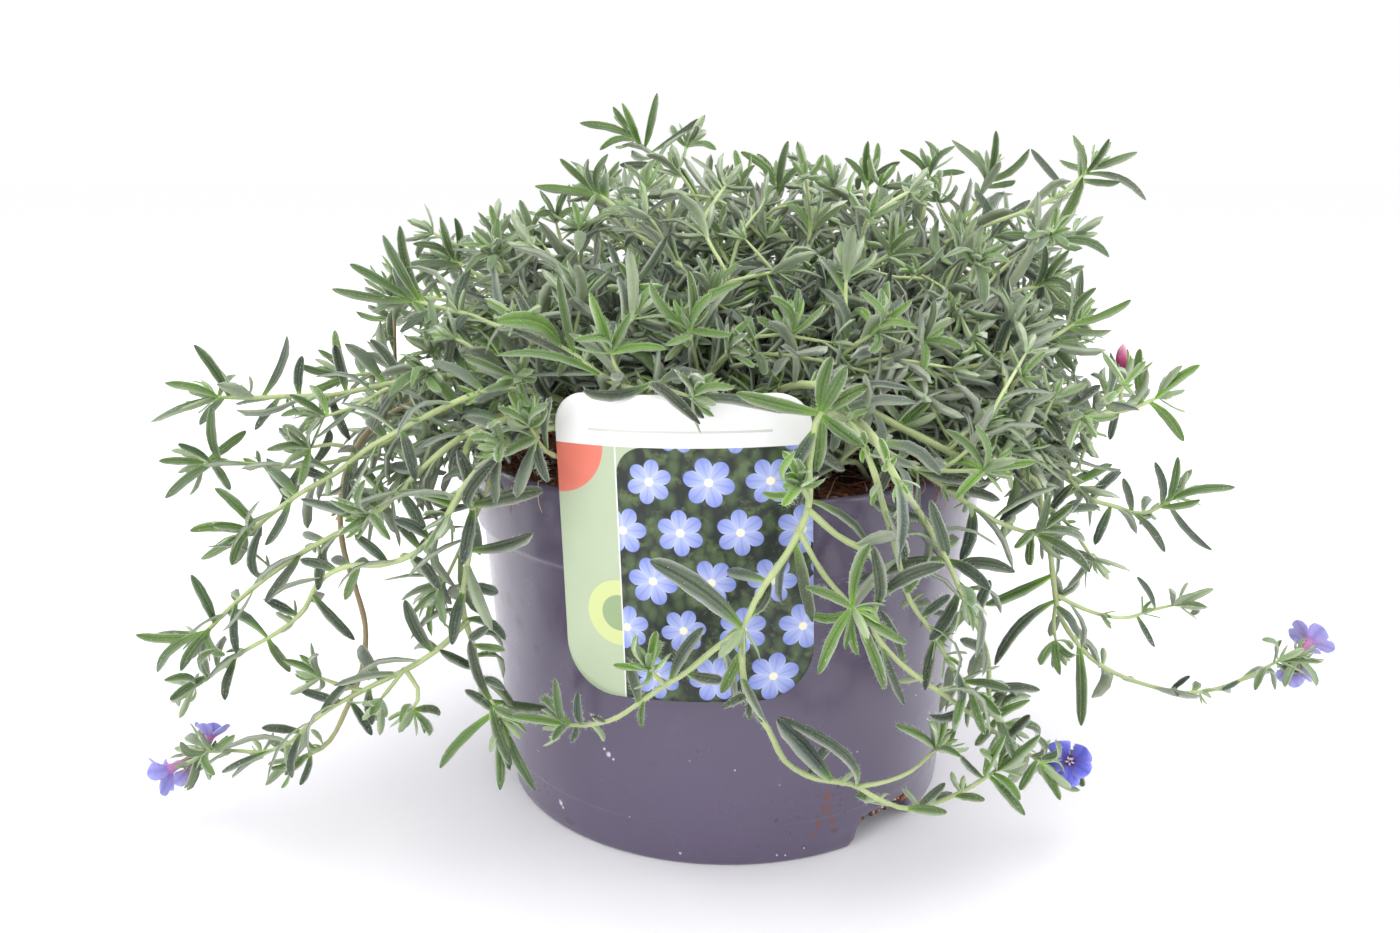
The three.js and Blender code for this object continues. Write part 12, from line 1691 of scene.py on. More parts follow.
 "l": [1000,-297,251,1695,25,3,60,0,32,8,94,986,-200,270,1750,27,3,62,0,-88,5,47,972,-314,260,1677,28,6,48,0,22,-11,97,957,-327,250,1644,30,6,51,0,-1,-27,96,929,-167,212,1632,34,9,41,0,-14,-31,94,900,-158,208,1636,37,4,
16,0,-17,-26,95,995,-235,258,1683,20,3,91,0,-20,20,96,150,-299,478,1591,34,13,0,0,66,7,75,404,-262,455,1701,34,8,0,0,71,-65,28,629,-139,272,1653,42,5,9,0,-41,7,91,821,-334,304,1714,33,12,7,0,60,-16,79]},
{"n": "shoot_top_right", "r": [70, 55], "o": 0, "k": 1, "f": 0, "p": [[348,272,1717],[312,302,1753],[284,361,1778],[255,410,1788]],
 "l": [1000,228,521,1796,25,6,62,0,-15,-11,98,976,204,476,1866,27,2,46,0,57,-39,73,953,173,476,1753,30,10,42,0,-10,31,94,930,260,522,1795,32,5,47,0,-29,-7,95,906,128,411,1819,35,3,39,0,26,45,85,882,265,520,1664,37,2,15,
0,-27,66,70,995,241,478,1813,20,3,75,0,-17,-36,92,995,210,450,1826,20,3,81,0,58,-9,81,150,373,401,1813,32,7,0,0,-55,-32,77,466,193,347,1837,34,7,0,0,57,40,71,783,251,503,1751,40,4,4,0,-21,20,96]},
{"n": "shoot_top_left", "r": [80, 55], "o": 0, "k": 1, "f": 0, "p": [[-151,80,1530],[-152,121,1612],[-121,274,1628],[-99,396,1628]],
 "l": [1000,-92,490,1672,25,9,65,0,9,-42,90,988,-104,502,1588,27,4,47,0,11,34,93,977,-10,456,1655,30,10,43,0,-44,25,86,965,-167,483,1671,32,2,48,0,59,5,81,953,-23,459,1530,35,3,41,0,21,67,71,942,-61,433,1763,37,4,19,0,
-66,74,-12,995,-83,454,1655,20,3,96,0,-19,-36,91,995,-118,476,1628,20,3,89,0,25,6,97,995,-57,459,1609,20,3,81,0,-6,32,95,150,-265,89,1676,32,6,0,0,67,20,72,376,-58,203,1727,39,10,0,0,-81,19,56,546,-222,340,1706,41,3,9,0,
69,3,73,734,-64,405,1556,42,10,7,0,10,54,84]},
{"n": "shoot_top_front", "r": [80, 55], "o": 0, "k": 1, "f": 0, "p": [[226,-109,1579],[231,-112,1653],[212,-202,1729],[199,-267,1777]],
 "l": [968,195,-374,1777,30,5,34,0,-5,4,100,150,170,0,1669,39,4,0,0,27,-32,91]},
{"n": "shoot_top_mid", "r": [80, 55], "o": 0, "k": 1, "f": 0, "p": [[159,96,1512],[157,135,1585],[115,235,1629],[84,316,1652]],
 "l": [1000,24,390,1707,25,4,60,0,52,-19,83,985,59,423,1642,27,9,43,0,-8,7,99,970,87,391,1743,29,6,40,0,-58,-61,54,955,-27,374,1660,31,6,40,0,24,25,94,940,143,424,1650,33,9,26,0,-34,14,93,925,31,325,1772,35,3,29,0,62,77,
13,910,1,395,1530,37,5,35,0,-29,60,75,995,45,363,1675,20,3,94,0,40,-12,91,995,54,379,1649,20,3,81,0,2,5,100,995,83,375,1710,20,3,76,0,-44,-63,64,150,122,256,1621,35,5,0,0,17,-41,90,450,78,213,1747,41,7,1,0,83,51,22,698,
13,364,1595,36,8,10,0,-3,27,96]},
{"n": "shoot_top_fan", "r": [70, 55], "o": 0, "k": 1, "f": 0, "p": [[-57,-369,1624],[-66,-325,1668],[-31,-275,1721],[-8,-230,1752]],
 "l": [935,-4,-112,1747,31,6,39,0,16,-2,99,892,-99,-172,1827,35,5,21,0,73,4,68,793,-57,-129,1785,33,5,11,0,41,-24,88]},
{"n": "shoot_top_front", "r": [70, 55], "o": 0, "k": 1, "f": 0, "p": [[231,-112,1653],[227,-109,1703],[227,-1,1732],[226,79,1746]],
 "l": [911,238,169,1612,37,7,32,0,2,76,65,995,231,138,1770,20,3,80,0,-11,-36,93,995,200,151,1746,20,3,97,0,18,5,98]},
{"n": "shoot_top_centre", "r": [80, 55], "o": 0, "k": 1, "f": 0, "p": [[8,-62,1531],[-39,-18,1610],[-91,-15,1722],[-139,-4,1793]],
 "l": [944,-157,119,1811,32,9,40,0,-19,-27,95,916,-223,-98,1833,35,5,23,0,11,44,89,902,-205,132,1796,37,8,25,0,-10,-21,97,995,-155,-6,1863,20,3,91,0,-90,38,-20,995,-180,2,1828,20,3,97,0,64,-5,76,995,-197,17,1830,20,3,86,
0,48,-21,85,385,-95,-105,1719,41,9,0,0,10,69,72,590,-186,79,1784,35,8,7,0,29,-45,85]},
{"n": "shoot_top_centre", "r": [70, 55], "o": 0, "k": 1, "f": 0, "p": [[-56,-18,1648],[-60,-16,1697],[-12,-30,1753],[21,-40,1791]],
 "l": []},
{"n": "shoot_right_front_2", "r": [80, 55], "o": 0, "k": 1, "f": 0, "p": [[418,-833,1043],[451,-808,989],[488,-868,927],[522,-907,850]],
 "l": [966,531,-967,797,28,7,46,0,46,-57,68,880,505,-1037,883,37,7,33,0,51,1,86,995,539,-898,789,20,3,94,0,84,-51,17]},
{"n": "shoot_right_drop", "r": [70, 55], "o": 0, "k": 1, "f": 0, "p": [[750,-438,1044],[813,-445,956],[888,-473,894],[957,-496,803]],
 "l": [973,997,-407,736,30,5,49,0,81,6,58,960,910,-446,695,32,7,25,0,93,32,-17,995,1015,-479,758,20,3,100,0,63,-20,75,150,908,-394,993,32,12,0,0,16,-27,95,381,855,-454,789,36,4,2,0,94,-28,20,554,979,-451,931,35,5,7,0,-7,
-43,90]},
{"n": "shoot_right_drop", "r": [80, 55], "o": 0, "k": 1, "f": 0, "p": [[485,-350,1134],[620,-416,1146],[798,-378,1061],[956,-364,959]],
 "l": [1000,1012,-320,914,25,8,60,0,62,2,78,968,1050,-323,1014,32,2,37,0,-16,-48,86,960,990,-246,900,34,3,41,0,69,12,71,943,1013,-255,951,37,3,17,0,51,-19,84,150,601,-408,1311,33,6,0,0,63,-71,-32,299,702,-358,1164,42,12,
0,0,13,-47,88,413,797,-436,1188,37,6,0,0,-28,41,87,525,757,-352,1001,42,4,8,0,81,37,45,650,837,-429,938,34,10,7,0,93,-4,37,769,948,-305,1071,40,9,7,0,6,-57,82,853,939,-266,908,40,11,5,0,76,21,62]},
{"n": "shoot_right_drop", "r": [70, 55], "o": 0, "k": 1, "f": 0, "p": [[550,-389,1146],[669,-403,1134],[783,-300,1085],[891,-228,1013]],
 "l": [1000,980,-161,1006,25,7,69,0,9,-1,100,990,935,-159,919,27,3,46,0,62,45,64,980,1008,-241,1001,30,4,43,0,15,42,89,970,926,-86,1025,32,2,27,0,47,-17,87,959,927,-273,867,35,8,29,0,93,28,23,949,996,-214,1111,37,3,30,0,
-55,56,62,995,935,-187,959,20,3,91,0,56,36,74,995,966,-220,989,20,3,80,0,26,34,91,995,920,-184,1000,20,3,93,0,37,4,93,344,727,-272,1096,43,11,0,0,49,5,87,525,825,-329,1004,42,3,6,0,61,51,61,683,841,-171,1135,38,10,10,0,
34,-49,80,838,894,-213,893,38,5,7,0,75,51,42]},
{"n": "shoot_back_7", "r": [80, 55], "o": 0, "k": 1, "f": 0, "p": [[525,236,1196],[663,257,1236],[836,158,1060],[991,91,892]],
 "l": [1000,1088,84,845,25,8,64,0,40,-25,88,993,1018,68,797,27,5,63,0,84,-41,35,987,1085,15,886,29,2,45,0,20,11,97,980,1069,97,824,31,7,40,0,65,-25,72,973,971,-26,806,33,6,38,0,63,-52,58,967,1123,85,948,35,10,38,0,-27,
-32,91,960,947,178,756,37,2,13,0,97,26,-2,995,1041,94,834,20,3,88,0,74,-25,63,995,1013,53,848,20,3,78,0,67,-35,65,995,1051,70,884,20,3,93,0,13,-10,99,150,695,282,1161,43,10,0,0,48,13,87,270,730,163,1317,37,12,5,0,16,70,
70,378,820,352,1217,32,10,0,0,38,-46,80,482,698,137,1045,32,10,0,0,51,-79,35,594,941,78,1131,31,6,2,0,-10,14,98,678,905,230,965,35,4,10,0,84,-10,53,755,901,18,913,37,12,8,0,65,-42,64,842,1086,89,987,38,8,9,0,-13,-17,98,
921,984,172,805,38,12,14,0,97,5,25]},
{"n": "shoot_back_7", "r": [70, 55], "o": 0, "k": 1, "f": 0, "p": [[748,213,1161],[788,218,1112],[803,311,1080],[821,379,1027]],
 "l": [1000,857,476,1005,25,4,62,0,3,22,98,983,793,449,948,27,4,56,0,15,76,63,965,927,428,971,30,2,56,0,13,61,78,948,817,506,1051,32,10,47,0,28,-10,95,931,813,354,873,35,10,29,0,28,96,-8,913,941,449,1093,37,6,34,0,-56,
35,75,995,814,439,975,20,3,97,0,19,66,73,995,856,410,987,20,3,88,0,22,67,70,995,841,449,1025,20,3,88,0,2,3,100,150,885,155,1152,41,4,0,0,4,32,95,483,718,367,1137,37,8,0,0,58,12,80,732,891,352,915,40,7,9,0,44,81,38]},
{"n": "shoot_back_5", "r": [80, 55], "o": 0, "k": 1, "f": 0, "p": [[251,505,1178],[342,636,1209],[458,761,1024],[562,879,845]],
 "l": [1000,578,939,743,25,10,48,0,51,71,49,993,665,900,783,27,4,54,0,38,49,79,987,576,1008,813,30,3,46,0,42,20,89,973,682,934,882,35,10,37,0,-29,26,92,967,440,982,782,37,5,27,0,27,71,65,995,575,909,784,20,3,84,0,54,70,
47,995,590,950,825,20,3,84,0,32,17,93,150,385,555,1320,34,5,0,0,-46,77,45,245,268,765,1217,40,4,6,0,43,12,89,364,477,624,1110,39,4,0,0,57,48,66,468,481,838,1163,42,6,0,0,12,-17,98,567,338,807,1002,40,10,7,0,22,80,56,646,
619,764,985,31,6,1,0,22,48,85,718,473,943,992,32,10,5,0,51,2,86,791,539,783,808,36,5,9,0,83,54,15,872,624,932,919,42,6,14,0,-8,2,100,936,507,923,748,39,9,16,0,36,87,34]},
{"n": "shoot_back_5", "r": [70, 55], "o": 0, "k": 1, "f": 0, "p": [[295,571,1208],[350,664,1187],[371,738,1073],[398,812,954]],
 "l": [1000,397,902,888,25,7,64,0,22,58,79,989,411,818,838,27,5,62,0,42,90,11,978,471,892,930,30,2,34,0,-1,36,93,966,309,876,882,32,2,27,0,4,79,62,955,501,762,878,35,6,26,0,66,53,53,944,402,953,1006,37,8,22,0,27,-21,94,
995,392,864,908,20,3,95,0,22,67,71,995,412,827,903,20,3,99,0,40,84,37,995,451,862,919,20,3,95,0,12,50,86,150,250,717,1174,30,12,0,0,33,46,82,341,334,694,1047,38,7,5,0,25,96,16,496,446,789,1140,42,4,0,0,-29,25,92,665,260,
836,1004,37,6,9,0,12,66,74,800,453,725,876,30,4,16,0,77,61,20]},
{"n": "shoot_back_3", "r": [70, 55], "o": 0, "k": 1, "f": 0, "p": [[-306,907,1110],[-312,953,1119],[-271,1003,1064],[-243,1050,1010]],
 "l": [1000,-181,1086,942,25,4,61,0,40,61,68,979,-211,1159,988,27,7,51,0,23,15,96,958,-255,1072,900,30,7,42,0,37,91,19,937,-108,1095,1004,32,5,48,0,-8,46,88,917,-316,1167,994,35,3,37,0,43,41,80,896,-188,961,908,37,2,28,
0,90,33,27,995,-239,1108,958,20,3,77,0,34,61,71,995,-211,1065,961,20,3,79,0,51,67,54,995,-205,1098,1001,20,3,89,0,2,19,98,150,-229,1024,1163,35,5,0,0,-53,6,84,508,-260,1135,1135,31,10,4,0,45,-31,83]},
{"n": "shoot_left_woody", "r": [70, 55], "o": 0, "k": 1, "f": 0, "p": [[-776,-186,1162],[-908,-168,1094],[-986,-87,981],[-1072,-24,844]],
 "l": [1000,-1157,-17,766,25,9,50,0,-60,38,70,991,-1076,21,758,27,8,50,0,-63,67,40,982,-1171,43,828,28,6,38,0,-15,12,98,973,-1106,-66,752,30,10,30,0,-93,24,29,964,-1062,88,803,32,9,37,0,-53,36,77,954,-1221,-46,845,34,2,
37,0,-14,45,88,945,-995,-44,727,35,8,33,0,-42,87,-25,936,-1129,106,905,37,4,12,0,-30,-37,88,995,-1108,-6,805,20,3,93,0,-58,40,71,995,-1091,-21,779,20,3,98,0,-83,49,28,995,-1091,41,803,20,3,80,0,-52,35,78,150,-877,-162,
1004,34,5,0,0,-94,14,30,446,-1076,-158,1009,33,12,0,0,-34,49,80,582,-926,-20,903,41,9,7,0,-34,79,51,722,-1123,-29,967,42,6,9,0,15,24,96,861,-1039,-69,785,37,4,11,0,-91,40,-4]},
{"n": "shoot_left_mid", "r": [80, 55], "o": 0, "k": 1, "f": 0, "p": [[-450,-351,1176],[-604,-411,1193],[-799,-309,1044],[-973,-249,888]],
 "l": [1000,-1027,-242,808,25,6,59,0,-80,23,56,994,-1047,-176,861,27,4,61,0,-41,-5,91,987,-1076,-298,852,30,3,46,0,-45,30,84,981,-965,-178,772,32,7,36,0,-75,56,34,974,-1097,-195,947,35,8,34,0,23,-23,95,968,-984,-366,794,
37,3,13,0,-87,-22,44,995,-1024,-208,857,20,3,94,0,-48,8,87,995,-1044,-253,867,20,3,79,0,-30,24,92,995,-994,-247,834,20,3,76,0,-89,26,38,150,-633,-337,1185,39,4,1,0,-21,-35,91,350,-671,-422,1052,35,12,2,0,-92,12,38,448,
-752,-265,1175,41,9,0,0,-28,-34,90,532,-835,-415,1084,33,4,8,0,-42,43,80,607,-733,-257,945,38,11,6,0,-57,77,28,700,-961,-198,1047,31,9,6,0,-5,-24,97,780,-957,-347,870,42,13,13,0,-81,13,58,869,-932,-140,875,41,9,12,0,-65,
27,71]},
{"n": "shoot_left_front", "r": [80, 55], "o": 0, "k": 1, "f": 0, "p": [[-434,-444,1147],[-544,-524,1154],[-639,-572,952],[-732,-624,763]],
 "l": [1000,-748,-677,662,25,9,61,0,-69,-59,42,992,-797,-597,676,27,8,44,0,-81,-24,53,985,-790,-697,725,28,6,48,0,-44,-18,88,978,-700,-620,647,30,2,53,0,-77,-62,-16,970,-844,-583,721,32,9,26,0,-49,-32,81,963,-702,-723,
706,34,6,32,0,-52,-57,64,955,-733,-510,680,35,4,28,0,-87,30,40,948,-853,-700,818,37,3,29,0,12,12,99,995,-778,-640,723,20,3,95,0,-57,-31,76,995,-750,-670,715,20,3,96,0,-61,-45,65,995,-740,-611,693,20,3,78,0,-96,-27,7,385,
-686,-551,1106,34,5,0,0,-17,-28,95,509,-657,-456,966,32,6,4,0,-80,6,59,628,-769,-633,952,37,9,2,0,-14,-7,99,730,-781,-647,875,34,9,7,0,-24,-14,96,826,-634,-625,697,31,9,20,0,-55,-83,-2,930,-813,-551,744,32,4,17,0,-60,
-27,75]},
{"n": "shoot_left_low_3", "r": [80, 55], "o": 0, "k": 1, "f": 0, "p": [[-465,-688,1173],[-545,-718,1139],[-612,-719,1073],[-678,-726,994]],
 "l": [954,-718,-815,932,30,4,36,0,-71,-17,69,939,-709,-644,938,32,7,29,0,-78,12,61,924,-802,-691,1042,34,4,41,0,11,-38,92,894,-760,-584,1008,37,6,25,0,-51,-31,80,150,-639,-665,1218,32,6,0,0,13,-65,75,855,-770,-673,1016,
30,12,13,0,-23,-30,92]},
{"n": "shoot_left_ridge", "r": [80, 55], "o": 0, "k": 1, "f": 0, "p": [[-715,-323,1429],[-747,-288,1427],[-755,-237,1412],[-768,-192,1387]],
 "l": [1000,-806,-97,1383,25,9,47,0,5,6,100,972,-817,-133,1301,27,2,47,0,-26,71,65,945,-724,-88,1372,30,4,50,0,-35,29,89,918,-896,-139,1378,32,8,43,0,14,50,85,890,-718,-167,1262,35,5,27,0,-1,96,28,862,-759,-80,1496,37,8,
30,0,-68,-43,59,995,-794,-149,1349,20,3,96,0,-17,60,78,995,-754,-116,1357,20,3,98,0,-24,40,88,995,-801,-134,1388,20,3,93,0,17,9,98,150,-740,-215,1332,34,4,0,0,-46,62,64,621,-731,-113,1513,39,10,8,0,-67,-37,65]},
{"n": "shoot_left_top", "r": [80, 55], "o": 0, "k": 1, "f": 0, "p": [[-520,-195,1439],[-556,-189,1440],[-592,-236,1425],[-626,-269,1402]],
 "l": [1000,-701,-363,1400,25,9,56,0,-11,6,99,972,-672,-335,1315,27,2,51,0,-53,-51,68,945,-734,-304,1416,28,7,48,0,18,-29,94,918,-639,-399,1391,30,2,39,0,-46,-4,89,890,-705,-250,1294,32,3,32,0,-72,-44,53,835,-565,-364,
1306,35,5,29,0,-41,-71,57,808,-758,-188,1399,37,8,28,0,-31,-52,80,995,-686,-293,1378,20,3,99,0,-23,-35,91,995,-676,-333,1407,20,3,98,0,-8,12,99,995,-637,-296,1355,20,3,77,0,-58,-65,50,150,-560,-151,1582,37,9,0,0,-97,-20,
-11,725,-583,-329,1299,33,10,6,0,-44,-76,48]},
{"n": "shoot_left_ridge", "r": [80, 55], "o": 0, "k": 1, "f": 0, "p": [[-466,-541,1391],[-490,-539,1402],[-501,-588,1432],[-514,-624,1447]],
 "l": [150,-604,-554,1351,36,12,0,0,-34,16,93]},
{"n": "shoot_left_level", "r": [80, 55], "o": 0, "k": 1, "f": 0, "p": [[-506,-437,1283],[-524,-449,1313],[-499,-419,1382],[-485,-399,1425]],
 "l": [1000,-464,-391,1516,25,2,46,0,-76,63,13,974,-488,-311,1485,27,9,55,0,17,-57,81,947,-388,-400,1494,30,10,50,0,-59,23,77,920,-533,-417,1532,32,6,25,0,78,51,36,894,-452,-267,1447,35,8,24,0,0,-24,97,868,-396,-488,
1522,37,9,23,0,-32,62,71,995,-453,-382,1480,20,3,88,0,-84,-14,53,995,-484,-394,1488,20,3,76,0,67,74,-7,995,-463,-341,1458,20,3,87,0,-13,-46,88,150,-565,-346,1344,39,7,0,0,-23,-50,84,585,-544,-420,1505,38,7,4,0,93,29,
24]},
{"n": "shoot_left_top", "r": [80, 55], "o": 0, "k": 1, "f": 0, "p": [[-332,-301,1371],[-357,-300,1390],[-380,-299,1415],[-402,-299,1429]],
 "l": [1000,-466,-307,1520,25,6,60,0,75,36,56,972,-506,-304,1439,27,2,51,0,10,4,99,945,-470,-223,1522,30,3,34,0,5,-76,65,918,-464,-389,1522,32,4,46,0,-7,75,66,890,-526,-238,1393,35,4,26,0,-26,-5,96,862,-384,-261,1598,37,
6,35,0,-92,-37,13,995,-449,-319,1471,20,3,98,0,43,52,74,995,-465,-279,1456,20,3,75,0,31,-25,92,150,-372,-351,1534,38,12,0,0,-53,83,18]},
{"n": "shoot_left_ridge", "r": [70, 55], "o": 0, "k": 1, "f": 0, "p": [[-280,-695,1366],[-281,-684,1404],[-248,-651,1438],[-224,-624,1460]],
 "l": [1000,-190,-554,1520,25,5,59,0,-8,-62,78,972,-131,-575,1454,27,8,50,0,-3,15,99,918,-232,-507,1470,30,6,46,0,29,-11,95,862,-247,-550,1544,34,4,22,0,65,-51,56,835,-87,-601,1428,35,6,24,0,8,25,96,808,-242,-650,1615,
37,3,23,0,64,77,7,995,-205,-571,1485,20,3,91,0,6,-43,90,995,-165,-601,1483,20,3,77,0,-40,9,91,150,-316,-528,1426,37,11,0,0,1,-25,97,597,-271,-559,1544,33,5,1,0,66,-52,55]},
{"n": "shoot_top_left_2", "r": [80, 55], "o": 0, "k": 1, "f": 0, "p": [[-238,-186,1399],[-220,-234,1422],[-167,-277,1409],[-129,-314,1392]],
 "l": [972,-96,-420,1388,27,10,50,0,33,6,94,945,-26,-323,1422,29,4,55,0,-27,-47,84,918,-108,-382,1290,31,3,51,0,52,-61,59,890,-89,-408,1472,33,7,40,0,25,63,73,862,-21,-264,1342,35,5,38,0,48,-43,76,835,-210,-446,1351,37,
6,11,0,44,-45,78,995,-94,-387,1376,20,3,99,0,29,-7,95,995,-77,-336,1350,20,3,87,0,45,-44,78,150,-317,-307,1376,42,13,2,0,-10,-29,95,546,-53,-238,1472,37,7,4,0,-20,-65,73]},
{"n": "shoot_top_left_2", "r": [70, 55], "o": 0, "k": 1, "f": 0, "p": [[-142,-302,1398],[-105,-330,1390],[-57,-347,1409],[-15,-365,1408]],
 "l": [1000,75,-436,1387,25,6,56,0,24,1,97,972,80,-407,1470,27,8,48,0,-46,20,87,945,85,-360,1366,29,8,47,0,36,-24,90,918,26,-473,1425,31,7,41,0,36,29,89,890,68,-305,1467,33,10,43,0,-1,-72,69,862,39,-419,1279,35,10,31,0,
72,-39,58,835,12,-419,1529,37,3,29,0,72,69,8,995,46,-379,1429,20,3,94,0,-34,-10,93,995,37,-417,1411,20,3,90,0,14,20,97,150,-104,-450,1278,36,5,0,0,50,-52,70,683,-13,-377,1534,35,5,3,0,94,18,-28]},
{"n": "shoot_centre_right", "r": [80, 55], "o": 0, "k": 1, "f": 0, "p": [[144,-225,1332],[139,-235,1364],[124,-242,1398],[112,-248,1421]],
 "l": [1000,66,-238,1518,25,6,60,0,72,-57,40,972,127,-303,1519,27,3,63,0,-58,67,45,945,8,-277,1496,28,8,43,0,57,8,81,918,93,-185,1505,30,7,49,0,-4,-83,56,890,85,-354,1486,32,5,45,0,-3,56,83,862,-7,-211,1451,34,8,26,0,23,
-23,95,835,191,-278,1542,35,4,23,0,-86,10,51,808,-21,-350,1424,37,7,29,0,5,7,100,995,67,-256,1479,20,3,98,0,78,-2,62,995,98,-246,1489,20,3,94,0,23,-97,8,995,93,-299,1479,20,3,87,0,5,74,67,150,131,-353,1418,32,6,0,0,8,50,
86]},
{"n": "shoot_top_front", "r": [80, 55], "o": 0, "k": 1, "f": 0, "p": [[201,-160,1441],[223,-160,1464],[279,-180,1440],[325,-195,1417]],
 "l": [1000,399,-208,1353,25,4,55,0,62,-19,76,972,407,-268,1415,27,6,55,0,23,22,95,945,441,-145,1400,30,8,38,0,29,-35,89,918,346,-268,1323,32,7,31,0,74,-40,55,890,440,-239,1516,35,5,35,0,-46,33,83,862,361,-90,1318,37,8,
26,0,85,9,51,995,388,-237,1404,20,3,75,0,25,8,96,995,388,-188,1404,20,3,92,0,22,-26,94,995,368,-209,1359,20,3,75,0,75,-24,61,150,312,-77,1501,40,3,0,0,-18,-31,93,567,297,-324,1423,35,12,5,0,57,-1,82]},
{"n": "shoot_front_star_3", "r": [70, 55], "o": 0, "k": 1, "f": 0, "p": [[402,-565,1364],[424,-544,1376],[404,-506,1415],[394,-474,1436]],
 "l": [1000,335,-384,1484,25,4,48,0,35,-25,90,972,405,-387,1510,27,10,56,0,-38,-57,73,945,311,-458,1513,29,6,53,0,69,38,62,918,356,-346,1420,31,5,49,0,-2,8,100,862,251,-444,1483,35,10,27,0,41,29,87,835,479,-352,1405,37,
3,31,0,-19,26,95,995,362,-415,1455,20,3,98,0,23,-19,96,995,410,-423,1469,20,3,79,0,-47,-37,80]},
{"n": "shoot_right_level", "r": [70, 55], "o": 0, "k": 1, "f": 0, "p": [[564,-392,1315],[582,-378,1330],[570,-393,1392],[565,-401,1431]],
 "l": [918,487,-462,1501,32,9,45,0,51,35,79,862,628,-531,1487,37,4,26,0,-25,36,90,995,563,-397,1491,20,3,81,0,-1,-100,5,995,568,-430,1482,20,3,93,0,-20,85,49,995,522,-403,1501,20,3,87,0,85,-12,51]},
{"n": "shoot_right_level", "r": [70, 55], "o": 0, "k": 1, "f": 0, "p": [[663,-323,1316],[704,-284,1330],[717,-229,1381],[735,-180,1405]],
 "l": [1000,788,-86,1426,25,3,65,0,-16,-13,98,977,768,-128,1485,27,9,41,0,-69,-43,58,954,704,-86,1441,28,4,37,0,42,-22,88,932,852,-123,1429,30,3,41,0,-33,20,92,909,746,-136,1489,32,8,49,0,9,-85,52,886,766,-58,1338,34,9,
23,0,15,35,92,840,617,-91,1447,37,4,16,0,52,11,85,995,736,-125,1430,20,3,99,0,21,-42,89,995,757,-150,1458,20,3,83,0,-84,-23,50,150,771,-307,1439,36,7,0,0,-42,85,31,538,615,-161,1426,42,6,3,0,52,-5,85]},
{"n": "shoot_left_top", "r": [80, 55], "o": 0, "k": 1, "f": 0, "p": [[-394,-276,1402],[-434,-254,1404],[-469,-230,1368],[-502,-208,1329]],
 "l": [1000,-557,-191,1237,25,7,50,0,-74,43,52,972,-553,-104,1286,27,2,43,0,-46,16,87,945,-606,-223,1299,30,6,44,0,-33,41,85,918,-474,-166,1222,32,4,45,0,-59,78,21,890,-587,-122,1380,35,7,26,0,3,-35,94,862,-558,-330,
1245,37,7,17,0,-85,5,52,995,-561,-200,1274,20,3,80,0,-61,38,69,995,-515,-161,1298,20,3,94,0,-55,36,75,995,-555,-168,1321,20,3,88,0,-14,4,99,150,-530,-316,1341,35,11,4,0,-54,22,81,594,-449,-70,1310,37,9,5,0,-54,35,76]},
{"n": "shoot_left_top", "r": [80, 55], "o": 0, "k": 1, "f": 0, "p": [[-256,-257,1277],[-262,-273,1304],[-257,-281,1342],[-255,-291,1367]],
 "l": [1000,-260,-361,1463,25,4,52,0,17,79,59,972,-253,-320,1465,27,7,50,0,12,95,29,918,-333,-343,1454,32,6,41,0,68,22,70,890,-189,-232,1476,35,5,39,0,-46,-67,58,862,-225,-453,1390,37,4,29,0,-3,19,98,150,-304,-220,1426,
36,10,0,0,28,-88,37]},
{"n": "shoot_front_star_1", "r": [80, 55], "o": 0, "k": 1, "f": 0, "p": [[-91,-602,1363],[-104,-607,1387],[-139,-567,1400],[-168,-538,1405]],
 "l": [1000,-220,-454,1402,25,4,61,0,-13,-5,99,972,-220,-483,1467,27,6,63,0,41,-47,79,945,-276,-529,1409,28,6,51,0,8,36,93,918,-173,-433,1431,30,9,36,0,-38,-26,89,890,-269,-551,1470,32,3,25,0,40,59,70,862,-229,-451,1306,
34,8,35,0,-43,45,78,835,-153,-460,1522,35,7,21,0,-86,-40,32,808,-311,-599,1399,37,6,27,0,-15,45,88,995,-194,-489,1428,20,3,95,0,-3,-44,90,995,-214,-489,1385,20,3,95,0,-20,20,96,150,-228,-578,1434,34,12,0,0,36,-22,91,678,
-188,-494,1525,35,11,6,0,-61,56,-56]},
{"n": "shoot_top_left_2", "r": [70, 55], "o": 0, "k": 1, "f": 0, "p": [[-97,-333,1392],[-68,-363,1396],[-71,-419,1388],[-66,-466,1371]],
 "l": [1000,-90,-557,1345,25,3,58,0,17,-32,93,972,-27,-558,1385,27,9,56,0,-27,1,96,945,-52,-543,1276,28,8,57,0,9,-75,66,918,-130,-573,1402,30,7,36,0,50,-8,86,890,45,-534,1354,32,8,29,0,-17,-48,86,862,-155,-525,1283,34,
10,28,0,-5,-75,65,835,-42,-557,1480,35,8,32,0,-52,50,70,808,32,-462,1247,37,3,29,0,41,-79,44,995,-76,-532,1337,20,3,86,0,10,-47,88,995,-66,-545,1384,20,3,88,0,10,16,98,995,-23,-520,1348,20,3,91,0,-8,-45,89,150,78,-312,
1397,39,6,5,0,7,-42,90,633,-175,-483,1292,39,10,1,0,-16,-71,68]},
{"n": "shoot_centre_right", "r": [80, 55], "o": 0, "k": 1, "f": 0, "p": [[157,-237,1387],[167,-252,1402],[169,-294,1388],[173,-327,1373]],
 "l": [1000,177,-427,1377,25,5,69,0,6,4,100,972,229,-401,1315,27,3,51,0,4,-59,81,945,110,-414,1341,30,5,32,0,21,-46,86,918,250,-429,1423,32,7,46,0,-56,-5,83,890,182,-350,1222,35,9,32,0,15,-96,22,862,82,-437,1463,37,5,19,
